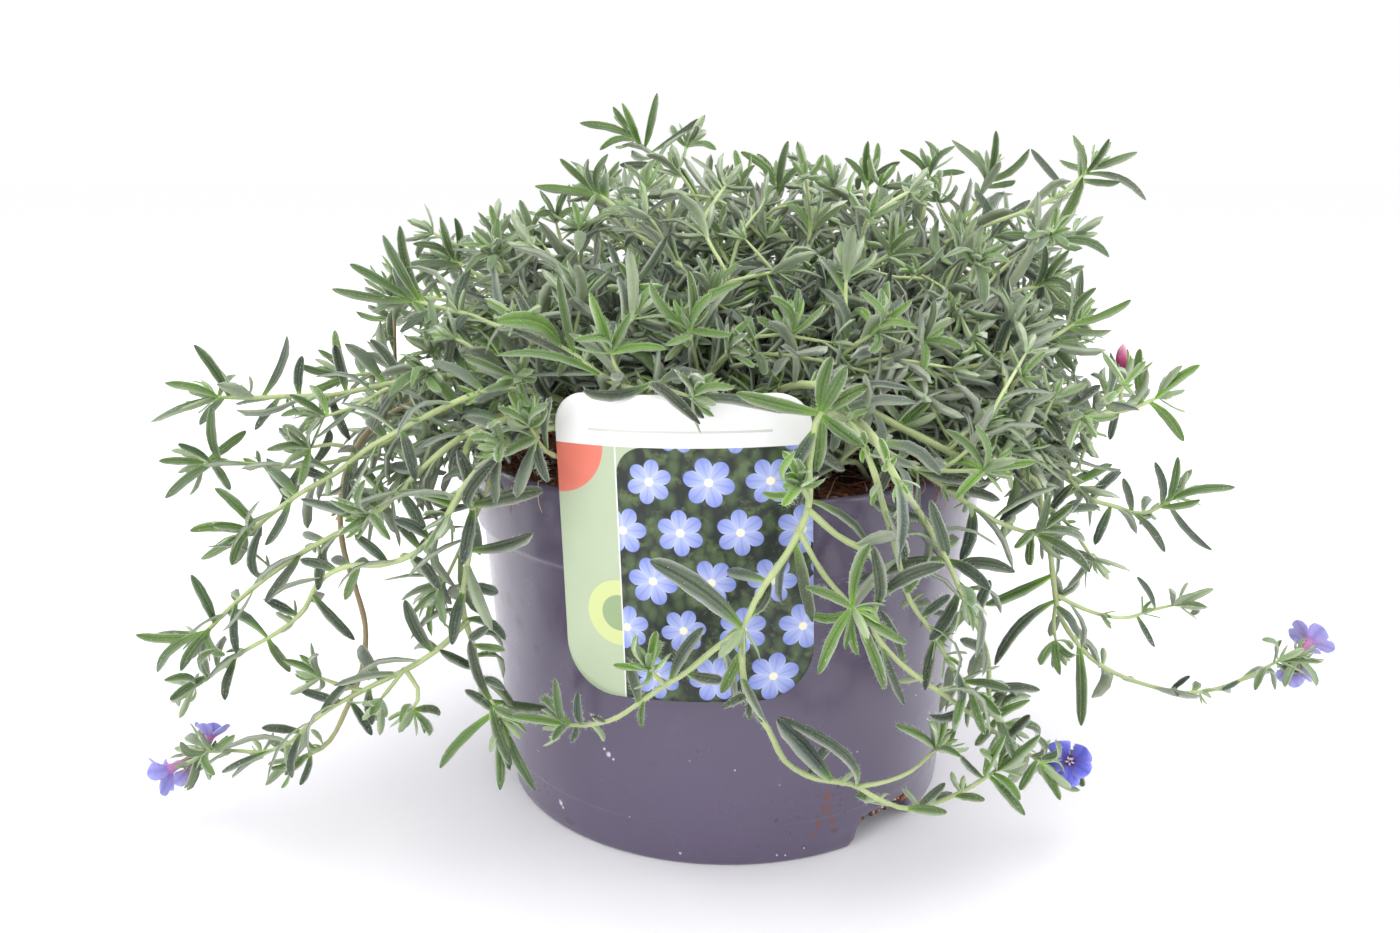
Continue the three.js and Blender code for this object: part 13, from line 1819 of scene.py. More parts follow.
0,77,-13,63,995,174,-394,1323,20,3,90,0,8,-59,80,995,160,-397,1373,20,3,79,0,24,-4,97,995,216,-385,1365,20,3,78,0,-22,-30,93,150,332,-251,1443,33,10,3,0,-27,-20,94]},
{"n": "shoot_right_level", "r": [80, 55], "o": 0, "k": 1, "f": 0, "p": [[678,-423,1316],[703,-416,1327],[711,-419,1369],[722,-420,1396]],
 "l": [1000,783,-391,1494,25,9,68,0,-65,-52,55,972,776,-456,1471,27,9,43,0,-53,56,64,945,688,-419,1508,28,8,36,0,96,-4,27,890,725,-512,1490,32,6,34,0,22,73,65,862,752,-325,1475,34,3,27,0,0,-68,73,808,624,-412,1512,37,5,
35,0,81,-7,58,995,761,-394,1448,20,3,76,0,-51,-56,65]},
{"n": "shoot_back_12", "r": [70, 55], "o": 0, "k": 1, "f": 0, "p": [[895,-62,1345],[908,-84,1330],[878,-135,1348],[859,-177,1348]],
 "l": [1000,823,-277,1393,25,8,60,0,6,39,92,972,844,-285,1308,27,3,42,0,-20,-30,93,945,750,-244,1379,29,2,43,0,40,-23,89,918,893,-286,1370,31,7,48,0,-45,5,89,890,792,-230,1257,33,10,42,0,-33,-62,71,862,811,-234,1472,35,
8,25,0,-25,-78,-58,835,942,-272,1262,37,10,27,0,-15,-66,74,995,836,-230,1371,20,3,87,0,13,35,93,995,856,-249,1337,20,3,86,0,-23,-13,96,995,795,-228,1335,20,3,83,0,6,-31,95,150,911,-197,1378,40,11,1,0,60,29,75,619,939,
-262,1414,37,11,5,0,-61,14,78]},
{"n": "shoot_left_mid", "r": [70, 55], "o": 0, "k": 1, "f": 0, "p": [[-748,-342,1234],[-765,-327,1251],[-773,-354,1303],[-783,-371,1333]],
 "l": [945,-807,-474,1335,30,8,51,0,-6,8,99,918,-816,-463,1384,32,8,38,0,10,49,87,890,-794,-310,1458,35,2,28,0,-9,-92,37,995,-821,-403,1368,20,3,90,0,50,29,82]},
{"n": "shoot_left_level", "r": [70, 55], "o": 0, "k": 1, "f": 0, "p": [[-509,-435,1323],[-530,-433,1340],[-572,-414,1333],[-604,-397,1323]],
 "l": [1000,-690,-355,1269,25,10,62,0,-44,23,87,972,-683,-312,1344,27,5,62,0,-9,-31,95,945,-713,-411,1310,28,8,55,0,-15,36,92,918,-647,-296,1254,30,8,40,0,-54,28,79,890,-697,-359,1403,32,7,45,0,58,-5,81,862,-682,-414,
1230,34,4,21,0,-72,28,64,835,-607,-253,1348,35,9,19,0,-55,-18,82,995,-657,-340,1311,20,3,98,0,-27,-5,96,995,-668,-388,1279,20,3,89,0,-51,28,81]},
{"n": "shoot_left_top", "r": [80, 55], "o": 0, "k": 1, "f": 0, "p": [[-246,-217,1236],[-260,-235,1259],[-296,-242,1278],[-326,-251,1289]],
 "l": [1000,-425,-295,1299,25,6,65,0,6,9,99,972,-418,-232,1356,27,4,47,0,43,-51,75,945,-381,-343,1345,30,7,55,0,-14,59,80,918,-466,-228,1249,32,4,39,0,-27,-17,95,890,-366,-247,1442,35,6,31,0,-69,-70,-21,862,-379,-399,
1233,37,4,14,0,-44,-12,89,995,-390,-285,1313,20,3,84,0,22,25,94,995,-383,-248,1315,20,3,89,0,39,-26,88,995,-363,-274,1340,20,3,89,0,33,74,58,150,-167,-245,1343,37,8,0,0,-76,-22,62]},
{"n": "shoot_left_top", "r": [70, 55], "o": 0, "k": 1, "f": 0, "p": [[-255,-287,1359],[-247,-313,1380],[-229,-363,1358],[-213,-406,1336]],
 "l": [1000,-158,-471,1285,25,6,48,0,15,-53,84,972,-234,-507,1298,27,8,51,0,27,-38,88,945,-137,-488,1355,29,7,46,0,-33,-13,94,918,-194,-447,1219,31,3,45,0,32,-85,41,890,-248,-529,1386,33,8,41,0,56,13,82,862,-80,-414,
1320,35,9,26,0,4,-59,81,835,-333,-456,1235,37,3,29,0,-3,-83,56,995,-189,-477,1342,20,3,83,0,0,8,100,995,-159,-446,1297,20,3,94,0,17,-57,81,150,-195,-462,1379,34,8,0,0,-3,4,100,662,-256,-522,1423,36,3,9,0,58,22,78]},
{"n": "shoot_top_front", "r": [80, 55], "o": 0, "k": 1, "f": 0, "p": [[175,-167,1332],[195,-171,1350],[240,-181,1330],[278,-188,1310]],
 "l": [1000,374,-169,1272,25,3,62,0,40,-19,90,972,351,-250,1242,27,3,64,0,62,-12,78,945,385,-199,1335,28,7,54,0,-19,-8,98,918,348,-149,1202,30,9,53,0,83,-6,56,890,347,-302,1309,32,10,34,0,43,25,87,862,347,-104,1284,34,8,
28,0,54,-23,81,835,269,-237,1177,35,5,19,0,87,-45,22,808,372,-264,1427,37,3,31,0,6,83,56,995,359,-187,1301,20,3,82,0,12,-17,98,995,327,-188,1259,20,3,76,0,71,-13,69,995,322,-229,1298,20,3,91,0,38,15,91,150,247,-273,1416,
39,13,1,0,-5,55,83]},
{"n": "shoot_right_fan", "r": [80, 55], "o": 0, "k": 1, "f": 0, "p": [[446,-243,1340],[454,-266,1357],[451,-305,1340],[451,-337,1322]],
 "l": [972,400,-434,1294,27,6,64,0,19,-37,91,945,520,-446,1320,29,8,34,0,-31,-22,92,918,444,-337,1221,31,8,34,0,-4,-100,8,890,406,-461,1382,33,5,43,0,50,17,85,862,569,-371,1268,35,3,18,0,10,-69,72,835,321,-362,1269,37,
10,25,0,-12,-71,70,995,480,-405,1295,20,3,82,0,-10,-40,91,995,439,-385,1271,20,3,89,0,0,-73,68,995,432,-413,1326,20,3,95,0,25,-2,97]},
{"n": "shoot_left_level", "r": [80, 55], "o": 0, "k": 1, "f": 0, "p": [[-720,-444,1280],[-746,-456,1282],[-744,-508,1301],[-749,-548,1305]],
 "l": [1000,-762,-664,1288,25,7,49,0,-2,-15,99,972,-796,-637,1365,27,5,57,0,53,25,81,945,-696,-644,1275,29,7,54,0,-17,-35,92,918,-822,-644,1262,31,10,41,0,3,-39,92,862,-660,-594,1212,35,9,40,0,16,-74,65,995,-765,-621,
1297,20,3,93,0,3,-11,99,995,-777,-609,1341,20,3,99,0,46,28,84,995,-722,-611,1327,20,3,76,0,-44,12,89,150,-837,-369,1179,39,9,0,0,-71,-2,71]},
{"n": "shoot_left_low_1", "r": [80, 55], "o": 0, "k": 1, "f": 0, "p": [[-505,-558,1265],[-521,-579,1275],[-512,-611,1296],[-509,-640,1307]],
 "l": [1000,-500,-734,1314,25,3,67,0,-1,8,100,972,-531,-710,1370,27,9,49,0,56,45,70,918,-570,-765,1302,30,2,39,0,22,-12,97,890,-464,-723,1335,32,9,48,0,-34,14,93,835,-630,-709,1377,35,7,28,0,61,-20,76,995,-537,-707,1322,
20,3,78,0,32,9,94,995,-500,-677,1352,20,3,100,0,-43,66,62,995,-487,-699,1305,20,3,93,0,-12,-6,99,150,-633,-536,1327,37,12,1,0,23,-59,78]},
{"n": "shoot_back_11", "r": [80, 55], "o": 0, "k": 1, "f": 0, "p": [[-401,-26,1234],[-407,-42,1259],[-379,-98,1258],[-360,-142,1251]],
 "l": [1000,-306,-220,1274,25,5,59,0,-29,9,95,972,-321,-224,1197,27,8,43,0,19,-46,87,945,-370,-260,1300,29,7,47,0,43,30,85,918,-248,-187,1253,31,5,50,0,-19,-40,90,890,-410,-238,1181,33,2,44,0,21,-59,78,862,-316,-218,
1384,35,8,21,0,26,-74,-63,835,-248,-142,1130,37,2,33,0,50,-63,59,995,-334,-201,1232,20,3,99,0,10,-27,96,995,-362,-225,1255,20,3,81,0,29,4,95,150,-441,-188,1274,38,3,2,0,-9,18,98,669,-448,-254,1229,42,3,11,0,35,-32,88]},
{"n": "shoot_top_fan", "r": [80, 55], "o": 0, "k": 1, "f": 0, "p": [[-61,-274,1186],[-51,-293,1213],[-27,-319,1232],[-7,-342,1244]],
 "l": [1000,68,-388,1308,25,5,60,0,-64,5,77,972,67,-440,1240,27,6,44,0,4,0,100,945,-14,-416,1297,29,6,41,0,55,47,70,918,106,-355,1268,31,3,52,0,-26,-32,91,890,-15,-465,1236,33,4,26,0,32,-3,95,862,59,-304,1332,35,9,35,0,
-26,-84,47,835,118,-359,1173,37,9,26,0,35,-36,86,995,37,-373,1261,20,3,82,0,-35,4,94,995,9,-410,1258,20,3,84,0,20,25,95]},
{"n": "shoot_centre_right", "r": [80, 55], "o": 0, "k": 1, "f": 0, "p": [[136,-207,1263],[135,-224,1282],[137,-265,1274],[138,-299,1264]],
 "l": [1000,123,-387,1216,25,10,58,0,5,-48,88,972,130,-419,1303,27,10,49,0,14,29,95,945,204,-373,1209,30,3,51,0,-1,-58,82,918,43,-396,1264,32,6,41,0,35,-33,88,890,129,-392,1371,35,3,22,0,8,-71,-70,862,146,-315,1116,37,4,
19,0,8,-98,19,995,122,-368,1264,20,3,78,0,20,-4,98,995,164,-358,1266,20,3,85,0,-27,-9,96,995,138,-352,1216,20,3,95,0,3,-66,75,150,223,-328,1300,34,6,0,0,-24,5,97]},
{"n": "shoot_right_level", "r": [80, 55], "o": 0, "k": 1, "f": 0, "p": [[294,-499,1249],[311,-517,1266],[338,-533,1282],[362,-548,1289]],
 "l": [1000,453,-567,1334,25,7,55,0,-47,-18,87,945,426,-575,1367,29,6,49,0,-76,1,65,918,499,-530,1283,31,7,34,0,6,-32,95,890,392,-675,1272,33,6,29,0,37,0,93,835,453,-583,1183,37,6,26,0,60,-33,73,995,419,-584,1337,20,3,
75,0,-48,33,81,995,436,-561,1298,20,3,97,0,-16,-20,97,995,403,-604,1289,20,3,91,0,18,13,98,150,319,-617,1263,41,10,0,0,28,11,95]},
{"n": "shoot_right_level", "r": [80, 55], "o": 0, "k": 1, "f": 0, "p": [[535,-472,1295],[565,-460,1295],[592,-443,1295],[618,-428,1287]],
 "l": [1000,691,-360,1298,25,7,61,0,5,-21,98,972,691,-384,1215,27,10,62,0,55,32,77,918,643,-292,1272,32,4,29,0,49,0,87,890,742,-460,1294,35,2,21,0,7,47,88,862,626,-318,1389,37,9,18,0,74,-50,45,995,661,-393,1285,20,3,95,
0,11,-6,99,995,663,-370,1257,20,3,76,0,42,15,90,995,682,-422,1279,20,3,92,0,10,30,95]},
{"n": "shoot_right_level", "r": [70, 55], "o": 0, "k": 1, "f": 0, "p": [[708,-276,1337],[728,-245,1341],[762,-229,1286],[790,-211,1234]],
 "l": [1000,867,-214,1146,25,7,50,0,71,35,61,974,838,-142,1189,27,2,58,0,47,25,85,948,788,-215,1126,28,3,39,0,85,53,1,922,904,-202,1208,30,7,33,0,24,33,91,895,765,-105,1173,32,4,42,0,52,53,67,869,829,-305,1149,34,8,29,0,
90,0,43,843,893,-113,1275,35,5,24,0,2,-18,98,817,678,-192,1149,37,8,27,0,-2,96,26,995,811,-213,1173,20,3,81,0,87,40,30,995,859,-189,1194,20,3,95,0,40,30,86,995,800,-159,1187,20,3,89,0,57,49,66,150,713,-188,1451,33,12,0,
0,87,-40,29,622,724,-240,1159,35,9,8,0,84,48,-24]},
{"n": "shoot_left_mid", "r": [70, 55], "o": 0, "k": 1, "f": 0, "p": [[-576,-410,1200],[-616,-395,1192],[-633,-335,1196],[-655,-288,1184]],
 "l": [1000,-702,-208,1135,25,7,61,0,-19,43,88,973,-660,-189,1200,27,6,48,0,-30,-16,94,945,-762,-233,1182,29,10,34,0,17,36,92,918,-631,-198,1108,31,3,37,0,-26,62,74,890,-694,-201,1277,33,4,42,0,18,-60,78,863,-766,-290,
1086,35,3,36,0,-48,60,64,836,-543,-178,1199,37,9,23,0,-48,32,82,995,-661,-225,1191,20,3,84,0,-27,-12,96,995,-707,-248,1192,20,3,99,0,31,21,93,150,-679,-331,1134,42,12,0,0,-54,9,84,654,-645,-236,1326,35,4,9,0,-32,73,
-60]},
{"n": "shoot_left_level", "r": [80, 55], "o": 0, "k": 1, "f": 0, "p": [[-366,-324,1205],[-385,-330,1223],[-425,-289,1216],[-458,-262,1204]],
 "l": [1000,-524,-170,1208,25,5,46,0,-16,-16,97,972,-555,-244,1223,27,8,42,0,24,35,91,945,-497,-172,1137,28,8,37,0,-48,36,80,918,-530,-203,1261,30,3,45,0,34,-31,89,890,-559,-280,1119,32,8,34,0,-60,38,71,862,-447,-113,
1205,34,9,22,0,-52,1,85,835,-582,-289,1280,35,3,29,0,27,68,68,808,-520,-338,1126,37,4,25,0,-79,22,58,995,-517,-248,1187,20,3,87,0,-20,33,92,995,-486,-214,1165,20,3,94,0,-48,37,80,599,-437,-186,1183,42,11,2,0,-37,22,90]},
{"n": "shoot_left_low_3", "r": [80, 55], "o": 0, "k": 1, "f": 0, "p": [[-349,-594,1165],[-348,-620,1187],[-320,-617,1238],[-304,-617,1270]],
 "l": [1000,-262,-654,1374,25,7,69,0,-40,80,45,972,-289,-574,1381,27,3,52,0,17,-93,32,945,-207,-620,1325,30,9,35,0,-52,2,86,918,-359,-543,1345,32,10,41,0,53,-44,73,890,-235,-499,1342,35,9,18,0,-10,-53,85,862,-300,-737,
1332,37,8,32,0,18,53,83,995,-257,-636,1337,20,3,86,0,-68,42,60,995,-302,-628,1328,20,3,94,0,63,77,11,995,-301,-584,1314,20,3,97,0,23,-80,56]},
{"n": "shoot_left_top", "r": [80, 55], "o": 0, "k": 1, "f": 0, "p": [[-236,-168,1178],[-236,-192,1198],[-224,-228,1204],[-215,-259,1205]],
 "l": [1000,-172,-339,1241,25,8,58,0,-36,21,91,972,-185,-364,1165,27,6,51,0,9,-33,94,945,-195,-314,1273,28,10,35,0,-51,56,65,918,-120,-319,1211,30,10,33,0,-27,-30,91,890,-268,-369,1158,32,5,48,0,19,-43,88,835,-118,-313,
1107,35,2,19,0,27,-63,72,808,-332,-345,1257,37,9,33,0,58,-24,78,995,-169,-319,1208,20,3,95,0,-22,-13,97,995,-216,-318,1204,20,3,89,0,17,-1,98,995,-218,-312,1242,20,3,89,0,44,50,75,150,-117,-231,1262,32,8,6,0,-56,-15,
81]},
{"n": "shoot_left_ridge", "r": [80, 55], "o": 0, "k": 1, "f": 0, "p": [[-107,-497,1174],[-109,-506,1198],[-133,-475,1233],[-152,-455,1253]],
 "l": [1000,-229,-425,1327,25,7,56,0,70,5,71,972,-193,-366,1287,27,6,49,0,1,-36,93,945,-153,-445,1357,30,10,46,0,-84,54,-10,918,-296,-419,1268,32,6,36,0,17,16,97,890,-95,-361,1325,35,5,20,0,-62,-26,74,862,-226,-536,1383,
37,2,26,0,14,84,53,995,-177,-447,1321,20,3,88,0,55,83,11,995,-216,-421,1286,20,3,77,0,43,-6,90,995,-159,-409,1291,20,3,89,0,-26,-64,73,150,-109,-476,1320,38,6,0,0,-6,-98,19]},
{"n": "shoot_front_main", "r": [80, 55], "o": 0, "k": 1, "f": 0, "p": [[78,-553,1189],[72,-560,1217],[34,-523,1245],[6,-498,1262]],
 "l": [1000,-45,-444,1304,25,7,50,0,29,-41,87,972,-83,-496,1283,27,7,50,0,24,32,92,945,-39,-381,1282,28,5,56,0,-15,-24,96,918,-49,-482,1361,30,9,40,0,76,55,34,890,-115,-457,1230,32,3,36,0,-12,21,97,862,23,-433,1375,34,4,
31,0,-85,-42,31,835,-106,-562,1354,35,9,37,0,25,69,68,808,-31,-383,1177,37,3,12,0,-36,36,86,995,-50,-474,1287,20,3,100,0,43,4,90,995,-40,-437,1279,20,3,97,0,4,-24,97,150,139,-528,1298,31,11,0,0,-62,-54,57,655,-91,-446,
1217,43,7,8,0,-11,18,98]},
{"n": "shoot_front_star_3", "r": [80, 55], "o": 0, "k": 1, "f": 0, "p": [[221,-489,1183],[228,-515,1208],[229,-534,1244],[231,-552,1267]],
 "l": [1000,251,-622,1323,25,4,56,0,-24,56,79,972,192,-602,1366,27,7,47,0,81,33,48,918,208,-662,1307,30,3,35,0,17,33,93,890,167,-558,1359,32,9,25,0,81,-33,48,862,335,-639,1306,34,10,41,0,-37,6,93,835,135,-652,1273,35,4,
16,0,23,-5,97,808,274,-478,1383,37,3,33,0,-27,-83,50,995,241,-599,1320,20,3,75,0,-19,71,67,995,208,-597,1311,20,3,98,0,51,46,73,995,243,-562,1336,20,3,75,0,-74,-67,2,150,269,-446,1331,41,4,0,0,-24,-87,43]},
{"n": "shoot_right_level", "r": [80, 55], "o": 0, "k": 1, "f": 0, "p": [[243,-409,1164],[249,-429,1186],[275,-438,1210],[297,-449,1225]],
 "l": [1000,349,-508,1304,25,6,49,0,-18,73,66,972,378,-437,1256,27,9,46,0,-30,-35,89,945,369,-536,1244,28,7,38,0,1,25,97,890,412,-458,1193,32,8,27,0,20,-18,96,862,257,-553,1315,34,8,29,0,65,39,65,835,367,-368,1347,35,4,
17,0,-3,-86,52,808,400,-535,1146,37,8,24,0,39,-21,90,995,342,-461,1279,20,3,87,0,-77,-10,63,995,370,-477,1235,20,3,98,0,-15,0,99,995,323,-499,1260,20,3,92,0,7,61,79,150,158,-483,1300,34,10,2,0,83,2,56]},
{"n": "shoot_right_fan", "r": [70, 55], "o": 0, "k": 1, "f": 0, "p": [[451,-327,1328],[463,-350,1302],[504,-337,1271],[536,-332,1232]],
 "l": [1000,582,-293,1154,25,4,60,0,80,19,57,972,601,-389,1146,27,8,60,0,79,-2,61,945,644,-278,1213,30,4,38,0,28,-14,95,918,506,-315,1103,32,5,49,0,94,33,-11,890,653,-422,1238,35,7,39,0,31,38,87,862,564,-182,1218,37,4,
28,0,63,-1,78,995,562,-308,1174,20,3,79,0,85,23,47,995,569,-355,1179,20,3,77,0,85,-3,53,995,615,-323,1211,20,3,87,0,26,3,96,666,518,-233,1156,43,9,11,0,72,47,51]},
{"n": "shoot_back_12", "r": [80, 55], "o": 0, "k": 1, "f": 0, "p": [[527,-38,1289],[579,-53,1312],[641,-109,1235],[697,-153,1162]],
 "l": [1000,734,-182,1072,25,3,50,0,70,-54,46,984,750,-236,1135,27,2,53,0,35,-10,93,968,806,-130,1093,29,10,43,0,55,-40,73,952,670,-228,1074,31,4,43,0,51,-71,49,937,819,-208,1187,33,4,22,0,-15,-14,98,921,711,-77,1056,35,
8,40,0,98,-10,17,905,661,-299,1177,37,4,27,0,60,-10,80,995,745,-200,1136,20,3,82,0,32,-20,93,995,743,-155,1125,20,3,75,0,56,-41,72,995,702,-192,1097,20,3,86,0,61,-65,45,369,555,-94,1181,33,7,0,0,53,-84,12,562,703,-207,
1295,35,11,8,0,4,30,95,754,721,-56,1115,42,11,13,0,88,-20,44]},
{"n": "shoot_left_front", "r": [70, 55], "o": 0, "k": 1, "f": 0, "p": [[-561,-534,1132],[-598,-532,1113],[-646,-478,1174],[-689,-438,1198]],
 "l": [1000,-733,-370,1276,25,9,53,0,8,-73,68,978,-800,-410,1245,27,2,46,0,43,19,88,957,-729,-338,1207,28,6,44,0,-17,-18,97,935,-742,-425,1292,30,8,48,0,73,59,34,914,-797,-409,1166,32,7,26,0,-14,24,96,892,-662,-328,1260,
34,9,44,0,-54,-36,76,871,-792,-497,1292,35,2,25,0,27,73,63,849,-733,-319,1090,37,7,11,0,-39,42,82,995,-742,-414,1239,20,3,87,0,62,2,78,995,-703,-390,1235,20,3,80,0,-26,-64,73,150,-580,-501,985,32,9,0,0,-98,16,7,476,-585,
-543,1241,33,8,0,0,-63,67,39,778,-762,-397,1156,43,10,7,0,-15,19,97]},
{"n": "shoot_left_low_1", "r": [80, 55], "o": 0, "k": 1, "f": 0, "p": [[-407,-473,1203],[-429,-476,1216],[-461,-439,1200],[-490,-413,1180]],
 "l": [1000,-571,-371,1105,25,2,61,0,-49,42,76,972,-487,-334,1137,27,3,57,0,-49,43,76,945,-595,-410,1155,30,7,37,0,-20,43,88,862,-595,-505,1106,37,4,27,0,-69,31,66,995,-555,-391,1160,20,3,89,0,-17,34,93,995,-516,-380,
1128,20,3,89,0,-58,53,63,995,-522,-352,1182,20,3,78,0,-25,-16,95,150,-584,-448,1195,37,7,5,0,-14,-23,96]},
{"n": "shoot_right_fan", "r": [80, 55], "o": 0, "k": 1, "f": 0, "p": [[372,-180,1196],[380,-204,1214],[385,-254,1180],[392,-295,1148]],
 "l": [1000,386,-363,1064,25,4,46,0,9,-78,62,972,395,-401,1145,27,5,56,0,10,-5,99,945,443,-333,1072,28,4,37,0,23,-78,58,918,333,-376,1170,30,7,53,0,52,-20,83,890,466,-405,1180,32,5,42,0,-38,-8,92,835,282,-392,1135,35,3,
25,0,30,-48,83,808,549,-323,1172,37,6,19,0,-22,-59,78,995,414,-367,1129,20,3,87,0,-3,-26,96,150,486,-210,1257,35,10,3,0,-44,-24,87,677,458,-239,1038,39,13,4,0,55,-81,19]},
{"n": "shoot_right_bud", "r": [80, 55], "o": 0, "k": 1, "f": 0, "p": [[622,-464,1247],[650,-461,1238],[671,-479,1218],[693,-491,1194]],
 "l": [1000,780,-491,1127,25,5,55,0,58,-31,75,972,716,-546,1115,27,7,58,0,68,-49,54,918,732,-456,1091,30,9,44,0,93,-20,32,890,719,-619,1160,32,3,30,0,55,-12,82,862,831,-445,1194,34,9,41,0,19,-47,86,835,633,-509,1065,35,
3,39,0,58,-81,-7,808,786,-614,1272,37,4,11,0,17,54,82,995,718,-512,1139,20,3,82,0,74,-43,51,995,734,-532,1173,20,3,92,0,38,-8,92,995,753,-489,1172,20,3,81,0,32,-33,89,150,684,-465,1076,34,6,3,0,95,12,27]},
{"n": "shoot_left_front", "r": [70, 55], "o": 0, "k": 1, "f": 0, "p": [[-498,-486,1101],[-554,-518,1150],[-583,-490,1139],[-610,-471,1119]],
 "l": [1000,-705,-455,1068,25,10,63,0,-40,34,85,945,-721,-421,1138,29,4,52,0,17,8,98,918,-697,-452,1061,31,8,33,0,-46,34,82,890,-627,-348,1122,33,7,42,0,-52,-8,85,862,-743,-514,1153,35,3,16,0,-1,60,80,835,-527,-349,1102,
37,9,32,0,-52,43,74,995,-645,-423,1096,20,3,77,0,-40,14,91,995,-671,-452,1112,20,3,95,0,-4,24,97,995,-644,-462,1067,20,3,77,0,-72,42,54,150,-654,-446,1160,39,9,0,0,-27,-48,84]},
{"n": "shoot_top_front", "r": [80, 55], "o": 0, "k": 1, "f": 0, "p": [[125,-128,1156],[151,-150,1181],[207,-193,1136],[254,-229,1094]],
 "l": [1000,333,-246,1038,25,6,53,0,47,-39,79,978,273,-310,1038,27,8,52,0,52,-39,76,956,373,-278,1112,30,8,31,0,-18,-17,97,934,318,-174,1011,32,5,43,0,81,-28,51,912,258,-356,1117,35,8,37,0,55,14,83,890,383,-188,1178,37,
8,22,0,-15,-77,63,995,279,-271,1052,20,3,92,0,53,-41,74,995,300,-268,1088,20,3,84,0,10,-3,99,995,316,-228,1047,20,3,75,0,55,-41,73,150,259,-257,1203,37,10,4,0,-12,14,98,457,233,-321,1213,31,10,1,0,38,39,84,725,363,-155,
1100,35,12,5,0,30,-49,82]},
{"n": "shoot_right_long", "r": [80, 55], "o": 0, "k": 1, "f": 0, "p": [[507,-632,1137],[535,-639,1137],[559,-652,1173],[582,-660,1191]],
 "l": [972,678,-678,1213,27,5,57,0,-23,-3,97,945,578,-735,1254,30,7,32,0,51,56,66,890,686,-779,1164,35,10,28,0,23,3,97,995,654,-670,1225,20,3,83,0,-43,-5,90,995,621,-701,1230,20,3,95,0,-16,59,79,995,631,-652,1246,20,3,
93,0,-60,-52,61,150,643,-636,1237,39,5,0,0,-63,21,75]},
{"n": "shoot_right_drop", "r": [70, 55], "o": 0, "k": 1, "f": 0, "p": [[708,-376,1121],[735,-364,1114],[771,-372,1117],[803,-375,1110]],
 "l": [1000,913,-396,1128,25,7,55,0,-13,13,98,972,910,-329,1078,27,4,43,0,34,-18,92,945,862,-430,1053,28,3,41,0,63,-6,77,918,902,-354,1165,30,6,37,0,-34,-41,85,890,874,-343,999,32,3,45,0,81,2,59,862,866,-473,1099,34,8,
32,0,45,22,87,835,885,-257,1141,35,7,17,0,35,-47,81,808,822,-463,989,37,3,18,0,80,-34,49,995,862,-386,1080,20,3,88,0,45,-2,89,995,873,-386,1119,20,3,85,0,-11,8,99,995,875,-342,1110,20,3,89,0,15,-32,93,150,781,-262,1185,
43,11,0,0,33,-62,71]},
{"n": "shoot_front_star_2", "r": [80, 55], "o": 0, "k": 1, "f": 0, "p": [[124,-456,1129],[149,-470,1142],[195,-467,1113],[234,-468,1084]],
 "l": [972,351,-492,1081,27,9,55,0,7,13,99,150,205,-562,1151,43,11,5,0,5,17,98]},
{"n": "shoot_right_bud", "r": [80, 55], "o": 0, "k": 1, "f": 0, "p": [[400,-417,1186],[398,-446,1191],[381,-469,1146],[370,-491,1103]],
 "l": [1000,403,-496,1009,25,4,49,0,0,-100,5,972,375,-580,1075,27,2,41,0,-29,-32,90,945,393,-596,1094,30,10,49,0,-37,-21,91,890,291,-623,1122,35,4,31,0,8,-2,100,862,504,-489,1019,37,3,21,0,35,-79,50,995,382,-536,1053,20,
3,87,0,-23,-75,62,150,332,-522,1144,39,8,0,0,10,-53,84]},
{"n": "shoot_right_bud", "r": [80, 55], "o": 0, "k": 1, "f": 0, "p": [[492,-494,1247],[559,-486,1232],[601,-452,1165],[646,-425,1093]],
 "l": [1000,723,-395,1048,25,4,66,0,41,26,87,982,682,-348,1082,27,9,42,0,43,-3,90,964,702,-485,1026,29,7,36,0,82,14,56,946,720,-339,1099,31,3,45,0,22,-13,97,928,635,-450,971,33,3,30,0,93,35,-6,910,765,-490,1115,35,5,37,
0,21,52,83,892,604,-268,1080,37,4,26,0,57,26,78,995,681,-384,1077,20,3,98,0,37,8,93,995,654,-393,1039,20,3,79,0,68,58,45,995,693,-446,1032,20,3,86,0,80,25,54,408,491,-413,1117,34,5,0,0,26,89,38,631,689,-517,1092,40,9,10,
0,73,29,61]},
{"n": "shoot_right_long", "r": [80, 55], "o": 0, "k": 1, "f": 0, "p": [[606,-606,1096],[633,-596,1089],[661,-585,1108],[687,-575,1114]],
 "l": [1000,763,-552,1169,25,6,46,0,-56,-10,82,972,777,-519,1077,27,7,64,0,33,8,94,945,789,-599,1137,28,2,59,0,-12,38,92,890,801,-536,1035,32,8,40,0,48,18,86,862,744,-591,1240,34,5,24,0,12,99,3,835,715,-451,1069,35,4,23,
0,47,14,87,808,807,-668,1056,37,9,35,0,47,18,86,995,767,-572,1132,20,3,99,0,-22,20,95,995,738,-544,1142,20,3,94,0,-26,-36,89,995,747,-537,1106,20,3,77,0,16,-4,99]},
{"n": "shoot_right_drop", "r": [75, 50], "o": 0, "k": 1, "f": 1, "p": [[514,-374,1147],[560,-374,1152],[624,-368,1170],[690,-333,1150]],
 "l": [160,632,-255,1196,34,9,0,0,79,-59,-13,240,652,-437,1099,35,13,0,0,60,52,61,320,590,-381,1267,35,5,0,0,96,8,-26,400,674,-292,1132,30,4,0,0,57,-53,62,480,688,-483,1216,27,7,0,0,68,71,16,560,669,-298,1266,27,3,0,0,
